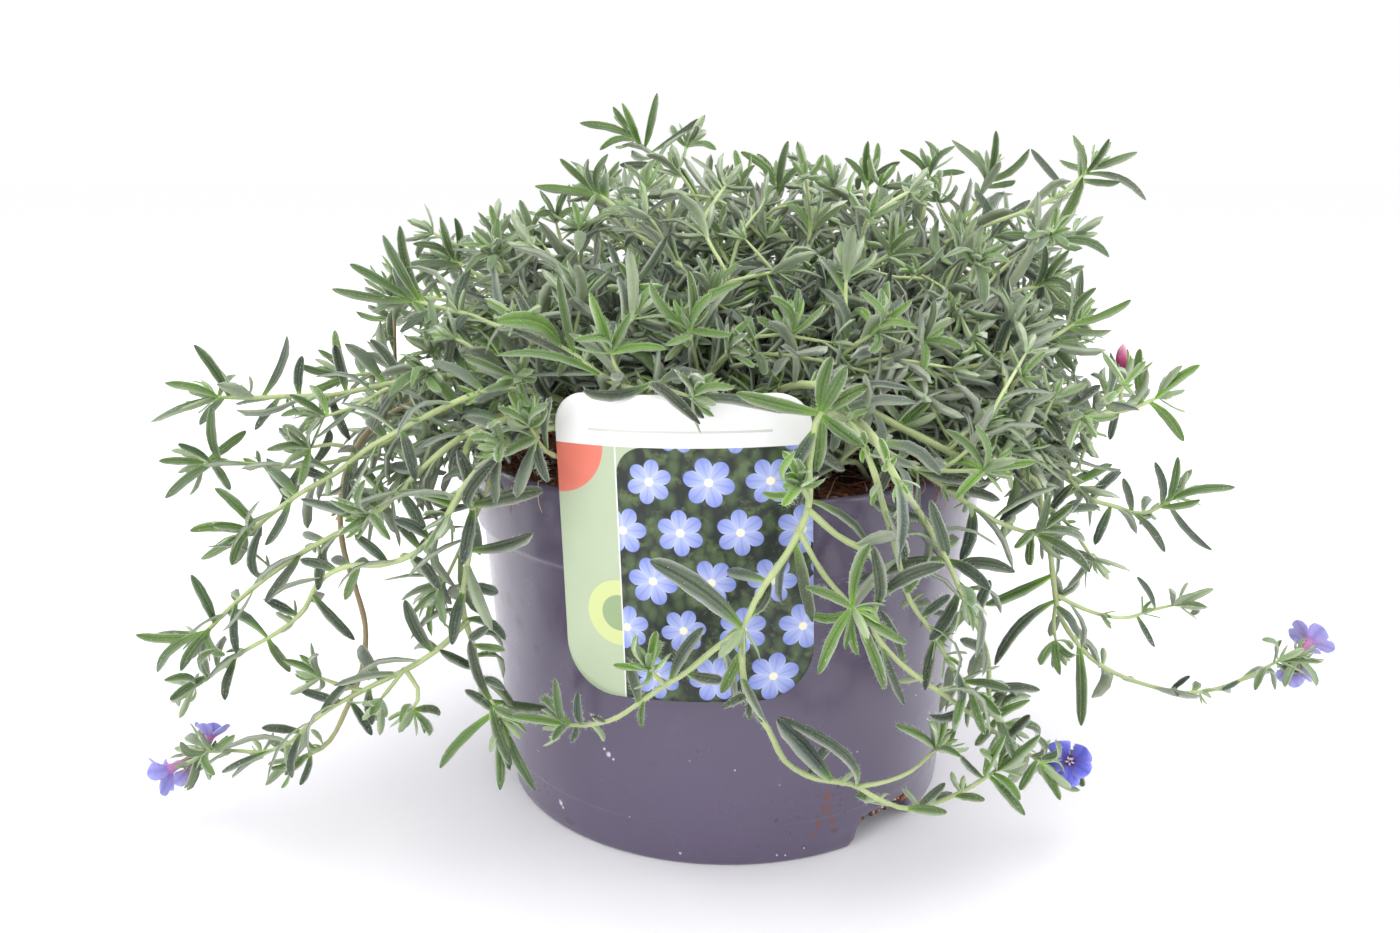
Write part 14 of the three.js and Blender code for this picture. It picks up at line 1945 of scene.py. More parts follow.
88,-36,-31,640,689,-363,1069,34,6,0,0,79,26,56,720,728,-399,1265,33,13,0,0,69,54,-48,800,687,-233,1137,25,8,29,0,93,-32,-19,880,771,-356,1105,23,7,57,0,15,98,11,960,748,-288,1177,27,11,86,0,34,-1,-94]},
{"n": "shoot_top_front", "r": [75, 50], "o": 0, "k": 1, "f": 1, "p": [[106,-108,1056],[135,-117,1108],[173,-140,1195],[237,-141,1232]],
 "l": [154,97,-216,1146,34,4,0,0,67,30,68,222,158,-37,1218,30,13,0,0,47,-81,36,289,257,-213,1105,34,10,0,0,6,13,99,357,61,-129,1218,36,11,0,0,80,-21,56,425,239,-81,1172,28,6,0,0,-14,-52,85,492,133,-264,1201,33,8,0,0,46,
26,85,560,139,-69,1291,31,12,0,0,60,-66,45,628,337,-156,1188,34,3,0,0,-2,-16,99,695,186,-221,1301,27,13,0,0,88,40,25,763,233,-40,1274,26,7,15,0,78,-54,32,831,306,-182,1214,28,13,40,0,24,56,79,898,252,-145,1295,25,8,64,0,
90,10,-43,966,294,-114,1241,28,4,88,0,21,-77,60]},
{"n": "shoot_left_top", "r": [75, 50], "o": 0, "k": 1, "f": 1, "p": [[-387,-299,1420],[-432,-261,1467],[-469,-201,1549],[-516,-108,1594]],
 "l": [149,-397,-196,1521,30,3,0,0,-99,-3,16,208,-506,-366,1538,32,11,0,0,-40,82,41,267,-461,-162,1423,34,11,0,0,-44,12,89,325,-398,-259,1590,34,5,0,0,-75,64,19,384,-563,-250,1492,34,10,0,0,10,56,82,443,-375,-121,1557,
26,4,0,0,-72,5,69,560,-548,-92,1501,27,12,0,0,-2,16,99,736,-453,-44,1541,35,3,6,0,-68,22,70,853,-602,-79,1549,27,10,48,0,25,65,72]},
{"n": "shoot_top_mid", "r": [75, 50], "o": 0, "k": 1, "f": 1, "p": [[110,127,1308],[81,102,1344],[10,76,1392],[-59,39,1414]],
 "l": [154,105,150,1431,35,6,0,0,-58,-76,28,222,92,-20,1333,33,7,0,0,-63,2,78,289,-43,179,1394,34,9,0,0,-23,-81,53,357,101,34,1469,33,11,0,0,-98,-9,15,425,-54,49,1352,28,7,0,0,-5,2,100,492,2,146,1483,29,12,0,0,-74,-67,2,
560,-9,-51,1441,30,5,0,0,-84,42,33,628,-133,132,1372,28,12,0,0,-30,-68,67,695,-43,36,1540,34,12,0,0,-87,-32,-37,763,-75,-44,1348,27,12,15,0,-72,10,69,831,-105,94,1444,29,9,40,0,-42,-91,-4,898,-56,-18,1459,25,12,64,0,-97,
7,-23,966,-117,25,1389,27,4,88,0,-19,-44,88]},
{"n": "shoot_front_star_1", "r": [75, 50], "o": 0, "k": 1, "f": 1, "p": [[-45,-475,1156],[17,-491,1189],[114,-495,1251],[298,-494,1204]],
 "l": [249,65,-397,1297,34,4,0,0,76,-64,7,301,137,-538,1157,30,7,0,0,27,17,95,353,26,-546,1341,34,10,0,0,99,15,2,405,136,-382,1250,31,4,0,0,42,-65,63,456,156,-602,1283,28,4,0,0,35,73,59,508,54,-441,1393,27,11,0,0,96,-25,
12,560,188,-471,1229,30,10,0,0,14,-28,95,612,115,-578,1317,30,6,0,0,94,32,9,664,183,-414,1290,34,13,0,0,79,-60,-16,715,224,-551,1176,34,3,0,0,72,48,49,767,242,-510,1345,28,7,17,0,79,6,-61,819,271,-439,1180,27,8,35,0,67,
-71,23,871,290,-548,1213,30,7,54,0,55,78,-29,922,339,-457,1240,29,11,72,0,42,-46,-78,974,334,-495,1161,21,12,91,0,68,4,73]},
{"n": "shoot_centre_right", "r": [75, 50], "o": 0, "k": 1, "f": 1, "p": [[136,-172,1152],[141,-210,1160],[141,-269,1163],[162,-345,1120]],
 "l": [160,179,-313,1072,28,6,0,0,-5,-57,82,240,48,-287,1272,36,6,0,0,50,-83,-25,320,252,-256,1189,33,6,0,0,-40,-92,2,480,138,-301,1281,34,4,0,0,-5,-86,-50,560,209,-310,1105,26,6,0,0,-40,-83,40,720,268,-380,1203,35,5,0,
0,-28,-66,-70,880,154,-403,1144,27,10,57,0,39,-7,-92,960,225,-389,1081,27,8,86,0,-70,-69,-21]},
{"n": "shoot_top_fan", "r": [75, 50], "o": 0, "k": 1, "f": 1, "p": [[-55,-287,1205],[23,-331,1216],[148,-378,1237],[291,-423,1141]],
 "l": [144,100,-258,1207,30,11,0,0,36,-92,15,193,36,-476,1183,29,12,0,0,93,22,31,242,66,-324,1312,29,13,0,0,67,-56,-48,291,148,-334,1127,28,4,0,0,42,-56,71,340,14,-473,1305,29,6,0,0,100,-9,-2,389,119,-251,1284,31,12,0,0,
71,-70,8,487,91,-383,1361,34,11,0,0,95,-26,-17,536,200,-283,1193,35,12,0,0,64,-66,38,584,145,-478,1244,34,9,0,0,97,25,4,633,226,-347,1309,27,7,0,0,60,-55,-58,682,242,-402,1096,27,8,0,0,78,-32,54,731,248,-513,1297,35,9,4,
0,73,4,-68,780,281,-328,1184,29,8,21,0,42,-77,-48,829,245,-460,1127,28,11,39,0,90,43,0,878,348,-433,1187,24,6,56,0,3,-9,-100,927,302,-381,1078,25,5,74,0,68,-73,7,976,338,-480,1120,23,11,91,0,44,69,-57]},
{"n": "shoot_centre_right", "r": [75, 50], "o": 0, "k": 1, "f": 1, "p": [[375,-198,1531],[450,-250,1513],[548,-341,1503],[605,-499,1382]],
 "l": [142,498,-243,1410,30,10,0,0,54,-62,57,274,468,-365,1414,27,11,0,0,92,-7,38,494,567,-356,1432,31,5,0,0,56,-35,75,626,478,-457,1430,35,4,0,0,91,-41,-2,670,648,-446,1583,27,7,0,0,15,-51,-85,714,605,-324,1383,27,10,0,
0,26,-94,-20,758,511,-483,1480,26,12,14,0,64,-36,-68,802,685,-479,1437,26,5,29,0,-52,-50,-70,846,557,-448,1363,30,13,45,0,61,-79,7,890,601,-558,1434,26,9,61,0,20,-4,-98,978,568,-546,1354,24,11,92,0,89,-28,-36]},
{"n": "shoot_top_centre", "r": [75, 50], "o": 0, "k": 1, "f": 1, "p": [[109,-45,1596],[66,-29,1641],[-20,-20,1709],[-175,-14,1731]],
 "l": [203,61,92,1678,29,11,0,0,-70,-40,59,258,72,-92,1746,28,7,0,0,-79,56,24,312,-80,-13,1590,34,4,0,0,-28,13,95,422,-4,-117,1716,29,11,0,0,-55,65,53,698,-123,-114,1828,28,11,0,0,-82,54,-20,752,-187,17,1635,31,4,12,0,
-56,-18,81,807,-134,20,1802,28,6,31,0,-86,-23,-46,863,-187,-93,1718,27,7,51,0,-69,70,17,917,-221,46,1721,25,11,71,0,-57,-79,23,973,-217,-33,1794,25,7,90,0,-77,27,-58]},
{"n": "shoot_left_ridge", "r": [75, 50], "o": 0, "k": 1, "f": 1, "p": [[-109,-429,1138],[-118,-465,1204],[-111,-488,1292],[-157,-522,1396]],
 "l": [149,-211,-540,1219,35,12,0,0,52,-5,86,208,-107,-398,1325,35,13,0,0,-20,-92,35,267,-55,-591,1269,27,8,0,0,-52,25,82,325,-207,-479,1272,28,7,0,0,61,-37,70,384,-73,-424,1306,33,7,0,0,-23,-82,52,443,-59,-580,1290,32,
9,0,0,-16,41,90,501,-208,-451,1343,31,9,0,0,60,-38,70,560,0,-478,1328,34,6,0,0,-49,-29,82,619,-233,-533,1346,34,4,0,0,50,-9,86,677,-52,-459,1404,29,9,0,0,-65,-55,52,736,-173,-590,1348,31,6,6,0,-3,36,93,795,-166,-441,
1404,26,7,27,0,-20,-81,56,853,-115,-570,1435,27,13,48,0,-89,26,38,912,-236,-541,1439,25,8,69,0,63,-16,76,971,-154,-504,1486,20,5,90,0,-70,-71,10]},
{"n": "shoot_top_left_2", "r": [75, 50], "o": 0, "k": 1, "f": 1, "p": [[-181,20,1060],[-180,-34,1113],[-177,-101,1208],[-177,-209,1220]],
 "l": [149,-110,-163,1084,32,6,0,0,-39,-16,91,208,-292,-58,1197,29,6,0,0,61,-72,33,267,-87,-25,1185,31,8,0,0,-43,-78,45,325,-217,-178,1144,36,11,0,0,31,14,94,384,-211,-12,1235,34,6,0,0,26,-91,33,443,-99,-115,1195,33,9,0,
0,-61,-17,77,501,-279,-133,1228,33,4,0,0,64,-24,73,560,-138,-64,1294,33,3,0,0,-30,-93,21,619,-146,-241,1167,28,8,0,0,-11,-22,97,677,-271,-126,1319,28,7,0,0,38,-91,15,736,-61,-177,1256,34,7,6,0,-46,-88,9,795,-245,-244,
1168,29,12,27,0,56,-63,54,853,-178,-262,1305,24,12,48,0,0,-64,-77,912,-138,-256,1188,23,11,69,0,-67,-54,51,971,-229,-265,1238,25,4,90,0,75,-64,-17]},
{"n": "shoot_top_front", "r": [75, 50], "o": 0, "k": 1, "f": 1, "p": [[256,-171,1452],[315,-184,1431],[365,-203,1432],[476,-203,1388]],
 "l": [154,301,-233,1310,31,4,0,0,99,3,11,222,412,-240,1515,32,12,0,0,59,7,-81,289,380,-65,1373,31,11,0,0,82,-56,-10,357,329,-300,1412,26,8,0,0,100,9,0,425,408,-178,1534,28,10,0,0,62,-66,-41,492,432,-224,1356,33,10,0,0,
48,-43,77,560,405,-314,1524,34,8,0,0,90,15,-41,628,485,-104,1452,33,4,0,0,61,-75,-26,695,447,-304,1317,31,9,0,0,88,43,20,831,467,-156,1349,25,5,40,0,79,-57,20,898,532,-261,1384,27,6,64,0,41,80,-43,966,544,-154,1411,21,6,
88,0,47,-49,-73]},
{"n": "shoot_back_1", "r": [75, 50], "o": 0, "k": 1, "f": 1, "p": [[-567,453,1308],[-601,468,1293],[-642,486,1282],[-685,497,1203]],
 "l": [160,-615,602,1365,36,6,0,0,-81,8,-58,240,-742,389,1296,30,4,0,0,-39,80,-45,320,-597,572,1178,28,12,0,0,-99,9,6,400,-676,508,1388,31,11,0,0,-72,30,-62,480,-733,423,1218,30,8,0,0,-57,75,35,560,-663,641,1293,31,8,0,
0,-94,-20,-28,640,-772,455,1293,27,12,0,0,-17,52,-83,720,-586,488,1118,34,4,0,0,-91,19,-37,800,-745,567,1237,27,12,29,0,-6,-30,-95,880,-711,421,1163,26,10,57,0,-24,75,-62,960,-680,544,1141,26,10,86,0,-74,-56,-38]},
{"n": "shoot_back_10", "r": [75, 50], "o": 0, "k": 1, "f": 1, "p": [[185,315,1073],[206,355,1113],[235,404,1175],[281,495,1186]],
 "l": [154,331,410,1123,32,10,0,0,-45,47,76,222,190,346,1225,34,7,0,0,52,85,0,289,204,464,1115,30,8,0,0,46,-7,88,357,305,325,1186,32,10,0,0,-11,83,54,425,130,424,1261,27,9,0,0,85,35,39,492,314,466,1141,30,12,0,0,-10,15,
98,560,259,347,1312,30,9,0,0,27,95,17,628,173,519,1189,34,12,0,0,75,26,61,695,378,433,1180,34,12,0,0,-15,91,39,763,230,478,1276,33,3,15,0,60,75,-30,831,273,524,1128,25,6,40,0,49,43,75,898,332,490,1225,26,3,64,0,-10,91,
-39,966,274,551,1203,24,7,88,0,94,12,-31]},
{"n": "shoot_top_fan", "r": [75, 50], "o": 0, "k": 1, "f": 1, "p": [[-23,-324,1235],[-19,-349,1291],[-45,-359,1409],[-64,-380,1477]],
 "l": [151,72,-464,1318,31,7,0,0,-41,13,90,214,-114,-369,1392,28,10,0,0,76,-44,48,277,124,-327,1374,33,9,0,0,-47,-41,78,340,-144,-417,1378,34,6,0,0,51,14,85,403,50,-286,1455,27,11,0,0,-68,-48,56,466,-84,-479,1424,35,4,0,
0,1,57,82,529,-101,-246,1473,26,13,0,0,7,-70,71,591,78,-410,1489,34,6,0,0,-64,9,76,654,-167,-449,1458,29,4,0,0,24,22,95,717,-69,-243,1520,28,8,0,0,-21,-64,74,780,-19,-433,1520,29,12,21,0,-79,29,55,843,-144,-393,1489,31,
4,44,0,47,-26,85,906,-40,-356,1552,23,11,66,0,-62,-74,27,969,-75,-429,1515,24,5,89,0,-20,68,71]},
{"n": "shoot_right_fan", "r": [75, 50], "o": 0, "k": 1, "f": 1, "p": [[453,-289,1348],[484,-279,1325],[541,-223,1310],[619,-158,1272]],
 "l": [154,416,-232,1220,30,4,0,0,92,-2,-40,222,583,-344,1331,27,9,0,0,33,64,-69,289,520,-119,1341,34,7,0,0,79,-15,-60,357,581,-262,1220,31,6,0,0,37,82,44,425,563,-236,1411,35,13,0,0,49,64,-58,492,477,-114,1253,26,10,0,
0,95,27,12,560,636,-251,1303,32,11,0,0,6,99,-9,628,533,-142,1401,27,8,0,0,75,47,-47,695,577,-170,1146,35,7,0,0,76,57,31,763,678,-211,1360,32,7,15,0,35,70,-62,831,572,-53,1279,28,13,40,0,93,0,-38,898,671,-177,1225,30,12,
64,0,14,97,20,966,674,-108,1308,26,6,88,0,30,19,-93]},
{"n": "shoot_top_fan", "r": [75, 50], "o": 0, "k": 1, "f": 1, "p": [[-42,-303,1222],[24,-306,1262],[137,-275,1359],[217,-243,1366]],
 "l": [147,72,-386,1239,31,11,0,0,49,56,67,203,30,-296,1411,30,8,0,0,97,-14,-19,258,114,-256,1249,29,5,0,0,23,-49,84,312,60,-425,1327,33,9,0,0,76,51,42,422,208,-305,1261,30,8,0,0,16,24,96,477,83,-334,1437,33,8,0,0,86,50,
7,532,144,-192,1363,33,10,0,0,57,-55,61,588,248,-355,1393,30,12,0,0,21,81,55,642,145,-217,1515,35,5,0,0,99,4,-11,698,273,-184,1283,33,5,0,0,54,-1,84,752,228,-322,1435,29,13,12,0,71,68,-17,807,204,-150,1398,32,12,31,0,96,
-21,-19,863,268,-275,1309,28,5,51,0,49,75,45,917,251,-233,1420,26,10,71,0,62,32,-72,973,261,-183,1342,24,5,90,0,77,-45,46]},
{"n": "shoot_left_top", "r": [75, 50], "o": 0, "k": 1, "f": 1, "p": [[-229,-126,1115],[-227,-138,1179],[-205,-157,1284],[-208,-140,1351]],
 "l": [154,-249,-17,1248,29,7,0,0,7,-67,74,222,-134,-192,1237,36,9,0,0,-60,15,79,289,-296,-197,1245,27,9,0,0,64,21,74,357,-206,-55,1299,32,5,0,0,11,-81,58,425,-136,-231,1231,27,12,0,0,-14,14,98,492,-277,-164,1325,27,12,
0,0,85,-15,51,560,-128,-105,1357,27,7,0,0,-38,-69,62,628,-184,-273,1332,34,7,0,0,9,46,89,695,-218,-250,1374,32,11,0,0,17,63,75,763,-255,-76,1372,34,4,15,0,42,-40,82,831,-150,-127,1409,25,9,40,0,-86,23,47,898,-258,-165,
1412,23,7,64,0,46,76,47,966,-208,-83,1402,26,4,88,0,-16,-69,71]},
{"n": "shoot_back_9", "r": [75, 50], "o": 0, "k": 1, "f": 1, "p": [[-171,464,1384],[-184,504,1426],[-201,542,1489],[-225,638,1512]],
 "l": [154,-176,653,1376,32,8,0,0,-26,15,96,222,-144,505,1548,31,11,0,0,-54,84,5,289,-282,533,1453,36,9,0,0,43,55,72,357,-96,629,1483,33,8,0,0,-61,11,78,425,-208,440,1578,32,11,0,0,-17,88,45,492,-275,609,1478,35,4,0,0,
20,-4,98,560,-118,561,1588,31,12,0,0,-81,43,40,628,-302,533,1550,33,8,0,0,28,85,45,695,-151,683,1444,28,10,0,0,-52,46,72,763,-215,617,1608,32,10,15,0,-26,87,-42,831,-308,674,1470,27,11,40,0,46,70,55,898,-177,680,1527,27,
7,64,0,-87,49,-4,966,-269,685,1560,22,9,88,0,37,76,-53]},
{"n": "shoot_top_centre", "r": [75, 50], "o": 0, "k": 1, "f": 1, "p": [[2,-50,1544],[25,25,1566],[94,123,1629],[188,250,1560]],
 "l": [242,146,64,1634,28,11,0,0,-39,92,-6,291,-49,118,1667,28,4,0,0,80,59,-6,340,117,106,1503,27,4,0,0,9,57,82,389,58,2,1688,26,9,0,0,40,89,21,438,18,185,1622,36,10,0,0,81,-1,59,487,195,82,1643,31,9,0,0,-24,81,53,536,
21,101,1714,33,10,0,0,72,67,16,584,117,195,1565,35,7,0,0,44,30,85,633,211,77,1735,29,10,0,0,35,93,-10,682,43,222,1654,31,11,0,0,83,53,-16,731,221,127,1503,33,12,4,0,28,96,11,780,200,255,1698,25,10,21,0,32,48,-82,829,133,
276,1519,32,7,39,0,97,19,15,878,274,220,1562,23,6,56,0,-24,86,-45,927,191,328,1582,29,12,74,0,58,-10,-81,976,212,269,1490,25,7,91,0,44,77,46]},
{"n": "shoot_back_11", "r": [75, 50], "o": 0, "k": 1, "f": 1, "p": [[-339,-21,1131],[-344,-82,1167],[-339,-181,1215],[-311,-319,1198]],
 "l": [147,-330,-48,1284,27,12,0,0,-17,-99,0,203,-265,-202,1112,27,13,0,0,-42,-44,80,258,-445,-133,1239,35,4,0,0,62,-77,15,312,-245,-105,1262,27,10,0,0,-41,-90,16,422,-402,-109,1344,33,9,0,0,21,-98,5,477,-219,-197,1200,
35,7,0,0,-47,-68,56,532,-449,-216,1208,27,4,0,0,54,-66,52,588,-296,-209,1335,32,4,0,0,-19,-92,-33,698,-432,-286,1305,31,11,0,0,54,-80,-27,752,-233,-256,1241,34,4,12,0,-32,-92,-24,863,-307,-371,1282,31,4,51,0,18,-53,-83,
917,-262,-331,1164,23,12,71,0,-48,-82,30]},
{"n": "shoot_top_front", "r": [75, 50], "o": 0, "k": 1, "f": 1, "p": [[259,-185,1320],[262,-221,1309],[262,-267,1322],[208,-354,1298]],
 "l": [160,166,-234,1184,35,9,0,0,36,-93,-3,240,257,-319,1396,34,6,0,0,9,-62,-78,320,361,-314,1243,28,9,0,0,-50,-78,37,400,195,-326,1354,30,11,0,0,84,-52,14,480,332,-268,1410,35,4,0,0,-25,-96,-12,560,253,-395,1248,26,5,
0,0,5,-44,90,640,193,-322,1399,29,7,0,0,11,-83,-54,720,350,-416,1302,35,7,0,0,-82,-55,-15,800,157,-325,1270,31,5,29,0,21,-97,15,880,194,-411,1378,28,5,57,0,-45,-43,-78,960,208,-415,1234,26,11,86,0,-78,-39,49]},
{"n": "shoot_back_9", "r": [75, 50], "o": 0, "k": 1, "f": 1, "p": [[-145,378,1215],[-152,420,1252],[-149,482,1310],[-169,548,1329]],
 "l": [157,-256,429,1309,27,7,0,0,50,79,36,230,-75,544,1216,28,6,0,0,-41,36,84,303,-145,377,1370,28,7,0,0,-8,95,30,377,-219,528,1269,33,9,0,0,48,24,84,450,-60,467,1330,35,4,0,0,-53,68,51,523,-237,484,1430,36,6,0,0,57,80,
18,597,-128,588,1263,27,7,0,0,-8,31,95,670,-94,503,1429,33,6,0,0,-41,91,3,743,-248,542,1334,31,12,8,0,45,84,31,817,-114,616,1311,30,6,35,0,-84,38,39,890,-202,581,1408,29,3,61,0,-9,81,-58,963,-218,623,1310,24,9,87,0,35,
40,85]},
{"n": "shoot_top_left_2", "r": [75, 50], "o": 0, "k": 1, "f": 1, "p": [[-182,-4,1116],[-251,27,1142],[-365,98,1178],[-520,218,1096]],
 "l": [142,-253,-45,1236,28,9,0,0,-81,59,-4,230,-244,98,1232,29,5,0,0,-98,0,-18,274,-357,-91,1174,26,9,0,0,-61,76,23,318,-325,165,1121,36,12,0,0,-73,-32,60,362,-292,37,1299,27,5,0,0,-83,52,-20,450,-268,181,1225,36,5,0,0,
-97,2,22,494,-361,-6,1243,34,6,0,0,-64,76,11,582,-361,155,1312,36,10,0,0,-88,29,-36,626,-483,62,1163,28,5,0,0,-20,97,16,670,-394,249,1136,33,10,0,0,-98,-17,4,714,-486,129,1264,30,9,0,0,-49,58,-65,802,-441,268,1186,27,7,
29,0,-77,7,-64,846,-546,164,1128,26,6,45,0,10,84,-53,890,-491,235,1063,22,4,61,0,-94,-1,34,934,-558,258,1157,24,3,76,0,-37,21,-91,978,-576,217,1055,25,6,92,0,-3,98,19]},
{"n": "shoot_centre_right", "r": [75, 50], "o": 0, "k": 1, "f": 1, "p": [[137,-166,1131],[129,-123,1223],[54,-39,1328],[101,90,1437]],
 "l": [143,225,-116,1246,28,5,0,0,-68,26,68,189,71,-208,1277,31,5,0,0,24,72,65,236,98,-18,1254,34,10,0,0,16,-39,91,282,186,-116,1316,36,12,0,0,-77,56,30,328,-9,-132,1326,31,4,0,0,36,77,53,375,118,29,1238,33,4,0,0,-55,-3,
83,421,114,-121,1371,33,8,0,0,-72,68,11,467,-14,-77,1256,31,10,0,0,1,49,87,514,121,13,1348,27,12,0,0,-92,7,39,560,-15,-137,1405,35,9,0,0,-26,90,34,606,34,47,1283,30,4,0,0,-29,16,94,653,102,-68,1423,28,4,0,0,-34,86,38,
699,-48,51,1369,30,6,0,0,56,47,68,745,174,33,1379,30,12,9,0,-39,66,65,792,33,41,1504,25,3,26,0,61,79,-7,838,97,122,1388,29,4,42,0,24,-10,97,884,144,69,1482,24,13,59,0,-24,96,-11,931,61,124,1468,22,9,75,0,94,28,17,977,
162,153,1458,27,4,92,0,-59,20,78]},
{"n": "shoot_top_front", "r": [75, 50], "o": 0, "k": 1, "f": 1, "p": [[124,-128,1152],[98,-184,1183],[35,-275,1241],[-35,-381,1194]],
 "l": [147,126,-160,1326,33,4,0,0,-41,-91,-2,203,146,-296,1110,36,12,0,0,-54,-44,72,258,-33,-175,1254,26,11,0,0,15,-97,19,312,155,-281,1297,28,9,0,0,-88,-48,-1,367,2,-273,1150,36,3,0,0,-3,-40,92,422,39,-168,1358,27,5,0,
0,-38,-92,10,477,111,-368,1243,34,5,0,0,-82,-9,56,532,-55,-232,1233,32,12,0,0,2,-83,55,588,65,-319,1380,32,3,0,0,-74,-63,-23,642,20,-357,1152,32,7,0,0,-56,-51,65,698,-109,-311,1311,28,9,0,0,-4,-90,-43,752,40,-442,1240,
32,12,12,0,-88,-15,-45,807,-64,-314,1138,28,4,31,0,-18,-98,9,863,-66,-414,1274,29,9,51,0,-23,-45,-87,973,-113,-396,1180,27,9,90,0,32,-88,-36]},
{"n": "shoot_top_right_3", "r": [75, 50], "o": 0, "k": 1, "f": 1, "p": [[390,71,1169],[445,47,1200],[518,12,1242],[618,-42,1231]],
 "l": [151,557,113,1220,27,7,0,0,21,-88,43,214,445,-80,1185,33,7,0,0,84,12,53,277,486,77,1342,33,5,0,0,78,-60,-17,340,569,26,1171,34,9,0,0,16,-36,92,403,442,-71,1319,30,8,0,0,98,4,19,466,565,123,1302,30,8,0,0,50,-81,30,
529,559,-68,1213,29,10,0,0,50,25,83,591,506,-4,1400,33,4,0,0,92,-39,-10,654,649,44,1206,30,7,0,0,31,-82,49,717,522,-135,1252,28,12,0,0,100,-7,-3,780,651,-1,1301,30,12,21,0,38,-69,-62,843,609,-39,1164,25,10,44,0,76,-39,
52,906,635,-88,1272,25,5,66,0,70,10,-71,969,690,-39,1230,24,10,89,0,-4,-98,-19]},
{"n": "shoot_back_3", "r": [75, 50], "o": 0, "k": 1, "f": 1, "p": [[-86,470,1114],[-142,500,1132],[-217,543,1189],[-354,564,1109]],
 "l": [149,-219,438,1109,26,4,0,0,-39,86,33,208,-117,634,1114,28,4,0,0,-95,4,32,267,-195,483,1237,29,4,0,0,-65,69,-32,325,-285,542,1068,30,11,0,0,-29,35,89,384,-103,575,1229,32,4,0,0,-91,19,36,443,-271,469,1250,35,8,0,0,
-9,94,34,501,-232,684,1143,33,6,0,0,-52,-6,85,560,-203,545,1301,35,7,0,0,-87,46,-16,619,-308,479,1127,33,3,0,0,-62,63,46,677,-284,700,1196,27,7,0,0,-91,-35,-23,736,-380,493,1217,34,3,6,0,-40,52,-75,853,-374,599,1158,24,
10,48,0,-25,-35,-90,912,-393,504,1083,22,10,69,0,-41,86,-32,971,-382,613,1066,24,12,90,0,-75,-65,-6]},
{"n": "shoot_back_1", "r": [75, 50], "o": 0, "k": 1, "f": 1, "p": [[-390,332,1150],[-440,346,1160],[-513,366,1197],[-594,365,1141]],
 "l": [157,-472,351,1272,32,5,0,0,-86,24,-46,230,-556,281,1089,29,5,0,0,-56,61,57,303,-496,491,1225,35,10,0,0,-91,-41,7,377,-504,283,1262,30,4,0,0,-72,69,5,450,-559,406,1137,30,11,0,0,-38,-2,93,523,-472,423,1338,27,10,0,
0,-100,4,4,597,-619,282,1215,33,12,0,0,-47,81,34,670,-581,483,1147,28,10,0,0,-87,-48,5,743,-661,328,1257,32,5,8,0,-49,19,-85,817,-590,334,1055,30,7,35,0,-92,31,23,890,-657,418,1138,30,12,61,0,-17,-64,-75,963,-650,319,
1121,24,10,87,0,-26,73,-63]},
{"n": "shoot_rim_right", "r": [75, 50], "o": 0, "k": 1, "f": 1, "p": [[306,-650,1179],[346,-611,1243],[471,-528,1356],[596,-437,1365]],
 "l": [143,330,-492,1267,29,7,0,0,52,-38,77,236,274,-571,1352,31,12,0,0,92,30,25,282,439,-535,1224,28,12,0,0,3,4,100,328,379,-673,1354,33,5,0,0,54,80,27,375,344,-495,1300,27,9,0,0,83,-12,55,467,359,-575,1430,27,3,0,0,87,
46,17,514,480,-420,1264,30,5,0,0,51,1,86,606,431,-449,1431,28,11,0,0,99,4,13,653,580,-513,1276,35,6,0,0,42,52,74,745,537,-375,1354,33,8,9,0,92,-23,31,792,612,-523,1358,26,8,26,0,30,95,10,838,568,-412,1438,31,5,42,0,79,
22,-58,884,592,-424,1306,23,5,59,0,68,29,67,977,621,-370,1379,22,13,92,0,89,-35,-28]},
{"n": "shoot_top_centre", "r": [75, 50], "o": 0, "k": 1, "f": 1, "p": [[9,-39,1110],[64,-100,1136],[159,-159,1215],[246,-263,1144]],
 "l": [146,80,-87,1219,33,7,0,0,44,-81,-39,249,3,-179,1198,28,9,0,0,92,-38,8,301,171,-31,1219,28,4,0,0,36,-91,19,405,81,-134,1278,34,12,0,0,93,-36,-6,456,219,-68,1169,27,12,0,0,24,-59,77,508,135,-222,1240,30,4,0,0,77,45,
45,560,177,-107,1314,32,10,0,0,59,-81,-4,612,251,-209,1128,27,5,0,0,43,-35,83,664,128,-264,1332,29,13,0,0,88,-44,-17,715,344,-155,1207,30,8,0,0,9,-96,-26,819,279,-292,1221,32,11,35,0,10,-22,-97,871,271,-224,1093,27,7,54,
0,11,-99,11,922,216,-324,1146,25,3,72,0,81,3,-59,974,333,-294,1143,27,4,91,0,-30,-59,-75]},
{"n": "shoot_back_3", "r": [75, 50], "o": 0, "k": 1, "f": 1, "p": [[-99,520,1169],[-127,520,1247],[-152,508,1366],[-212,416,1472]],
 "l": [146,-163,431,1271,32,11,0,0,-12,65,75,198,-193,624,1287,28,3,0,0,-2,-59,80,249,-18,478,1348,33,4,0,0,-74,13,66,301,-236,456,1270,34,11,0,0,15,22,96,353,-102,632,1344,26,8,0,0,-38,-52,76,405,-125,413,1375,28,6,0,0,
-28,67,69,456,-222,575,1357,26,10,0,0,41,-37,83,508,-38,562,1395,28,11,0,0,-59,-21,78,560,-169,378,1390,27,9,0,0,-12,42,90,612,-239,577,1403,36,9,0,0,14,-54,83,664,-59,495,1480,34,11,0,0,-74,-38,55,715,-234,390,1405,28,
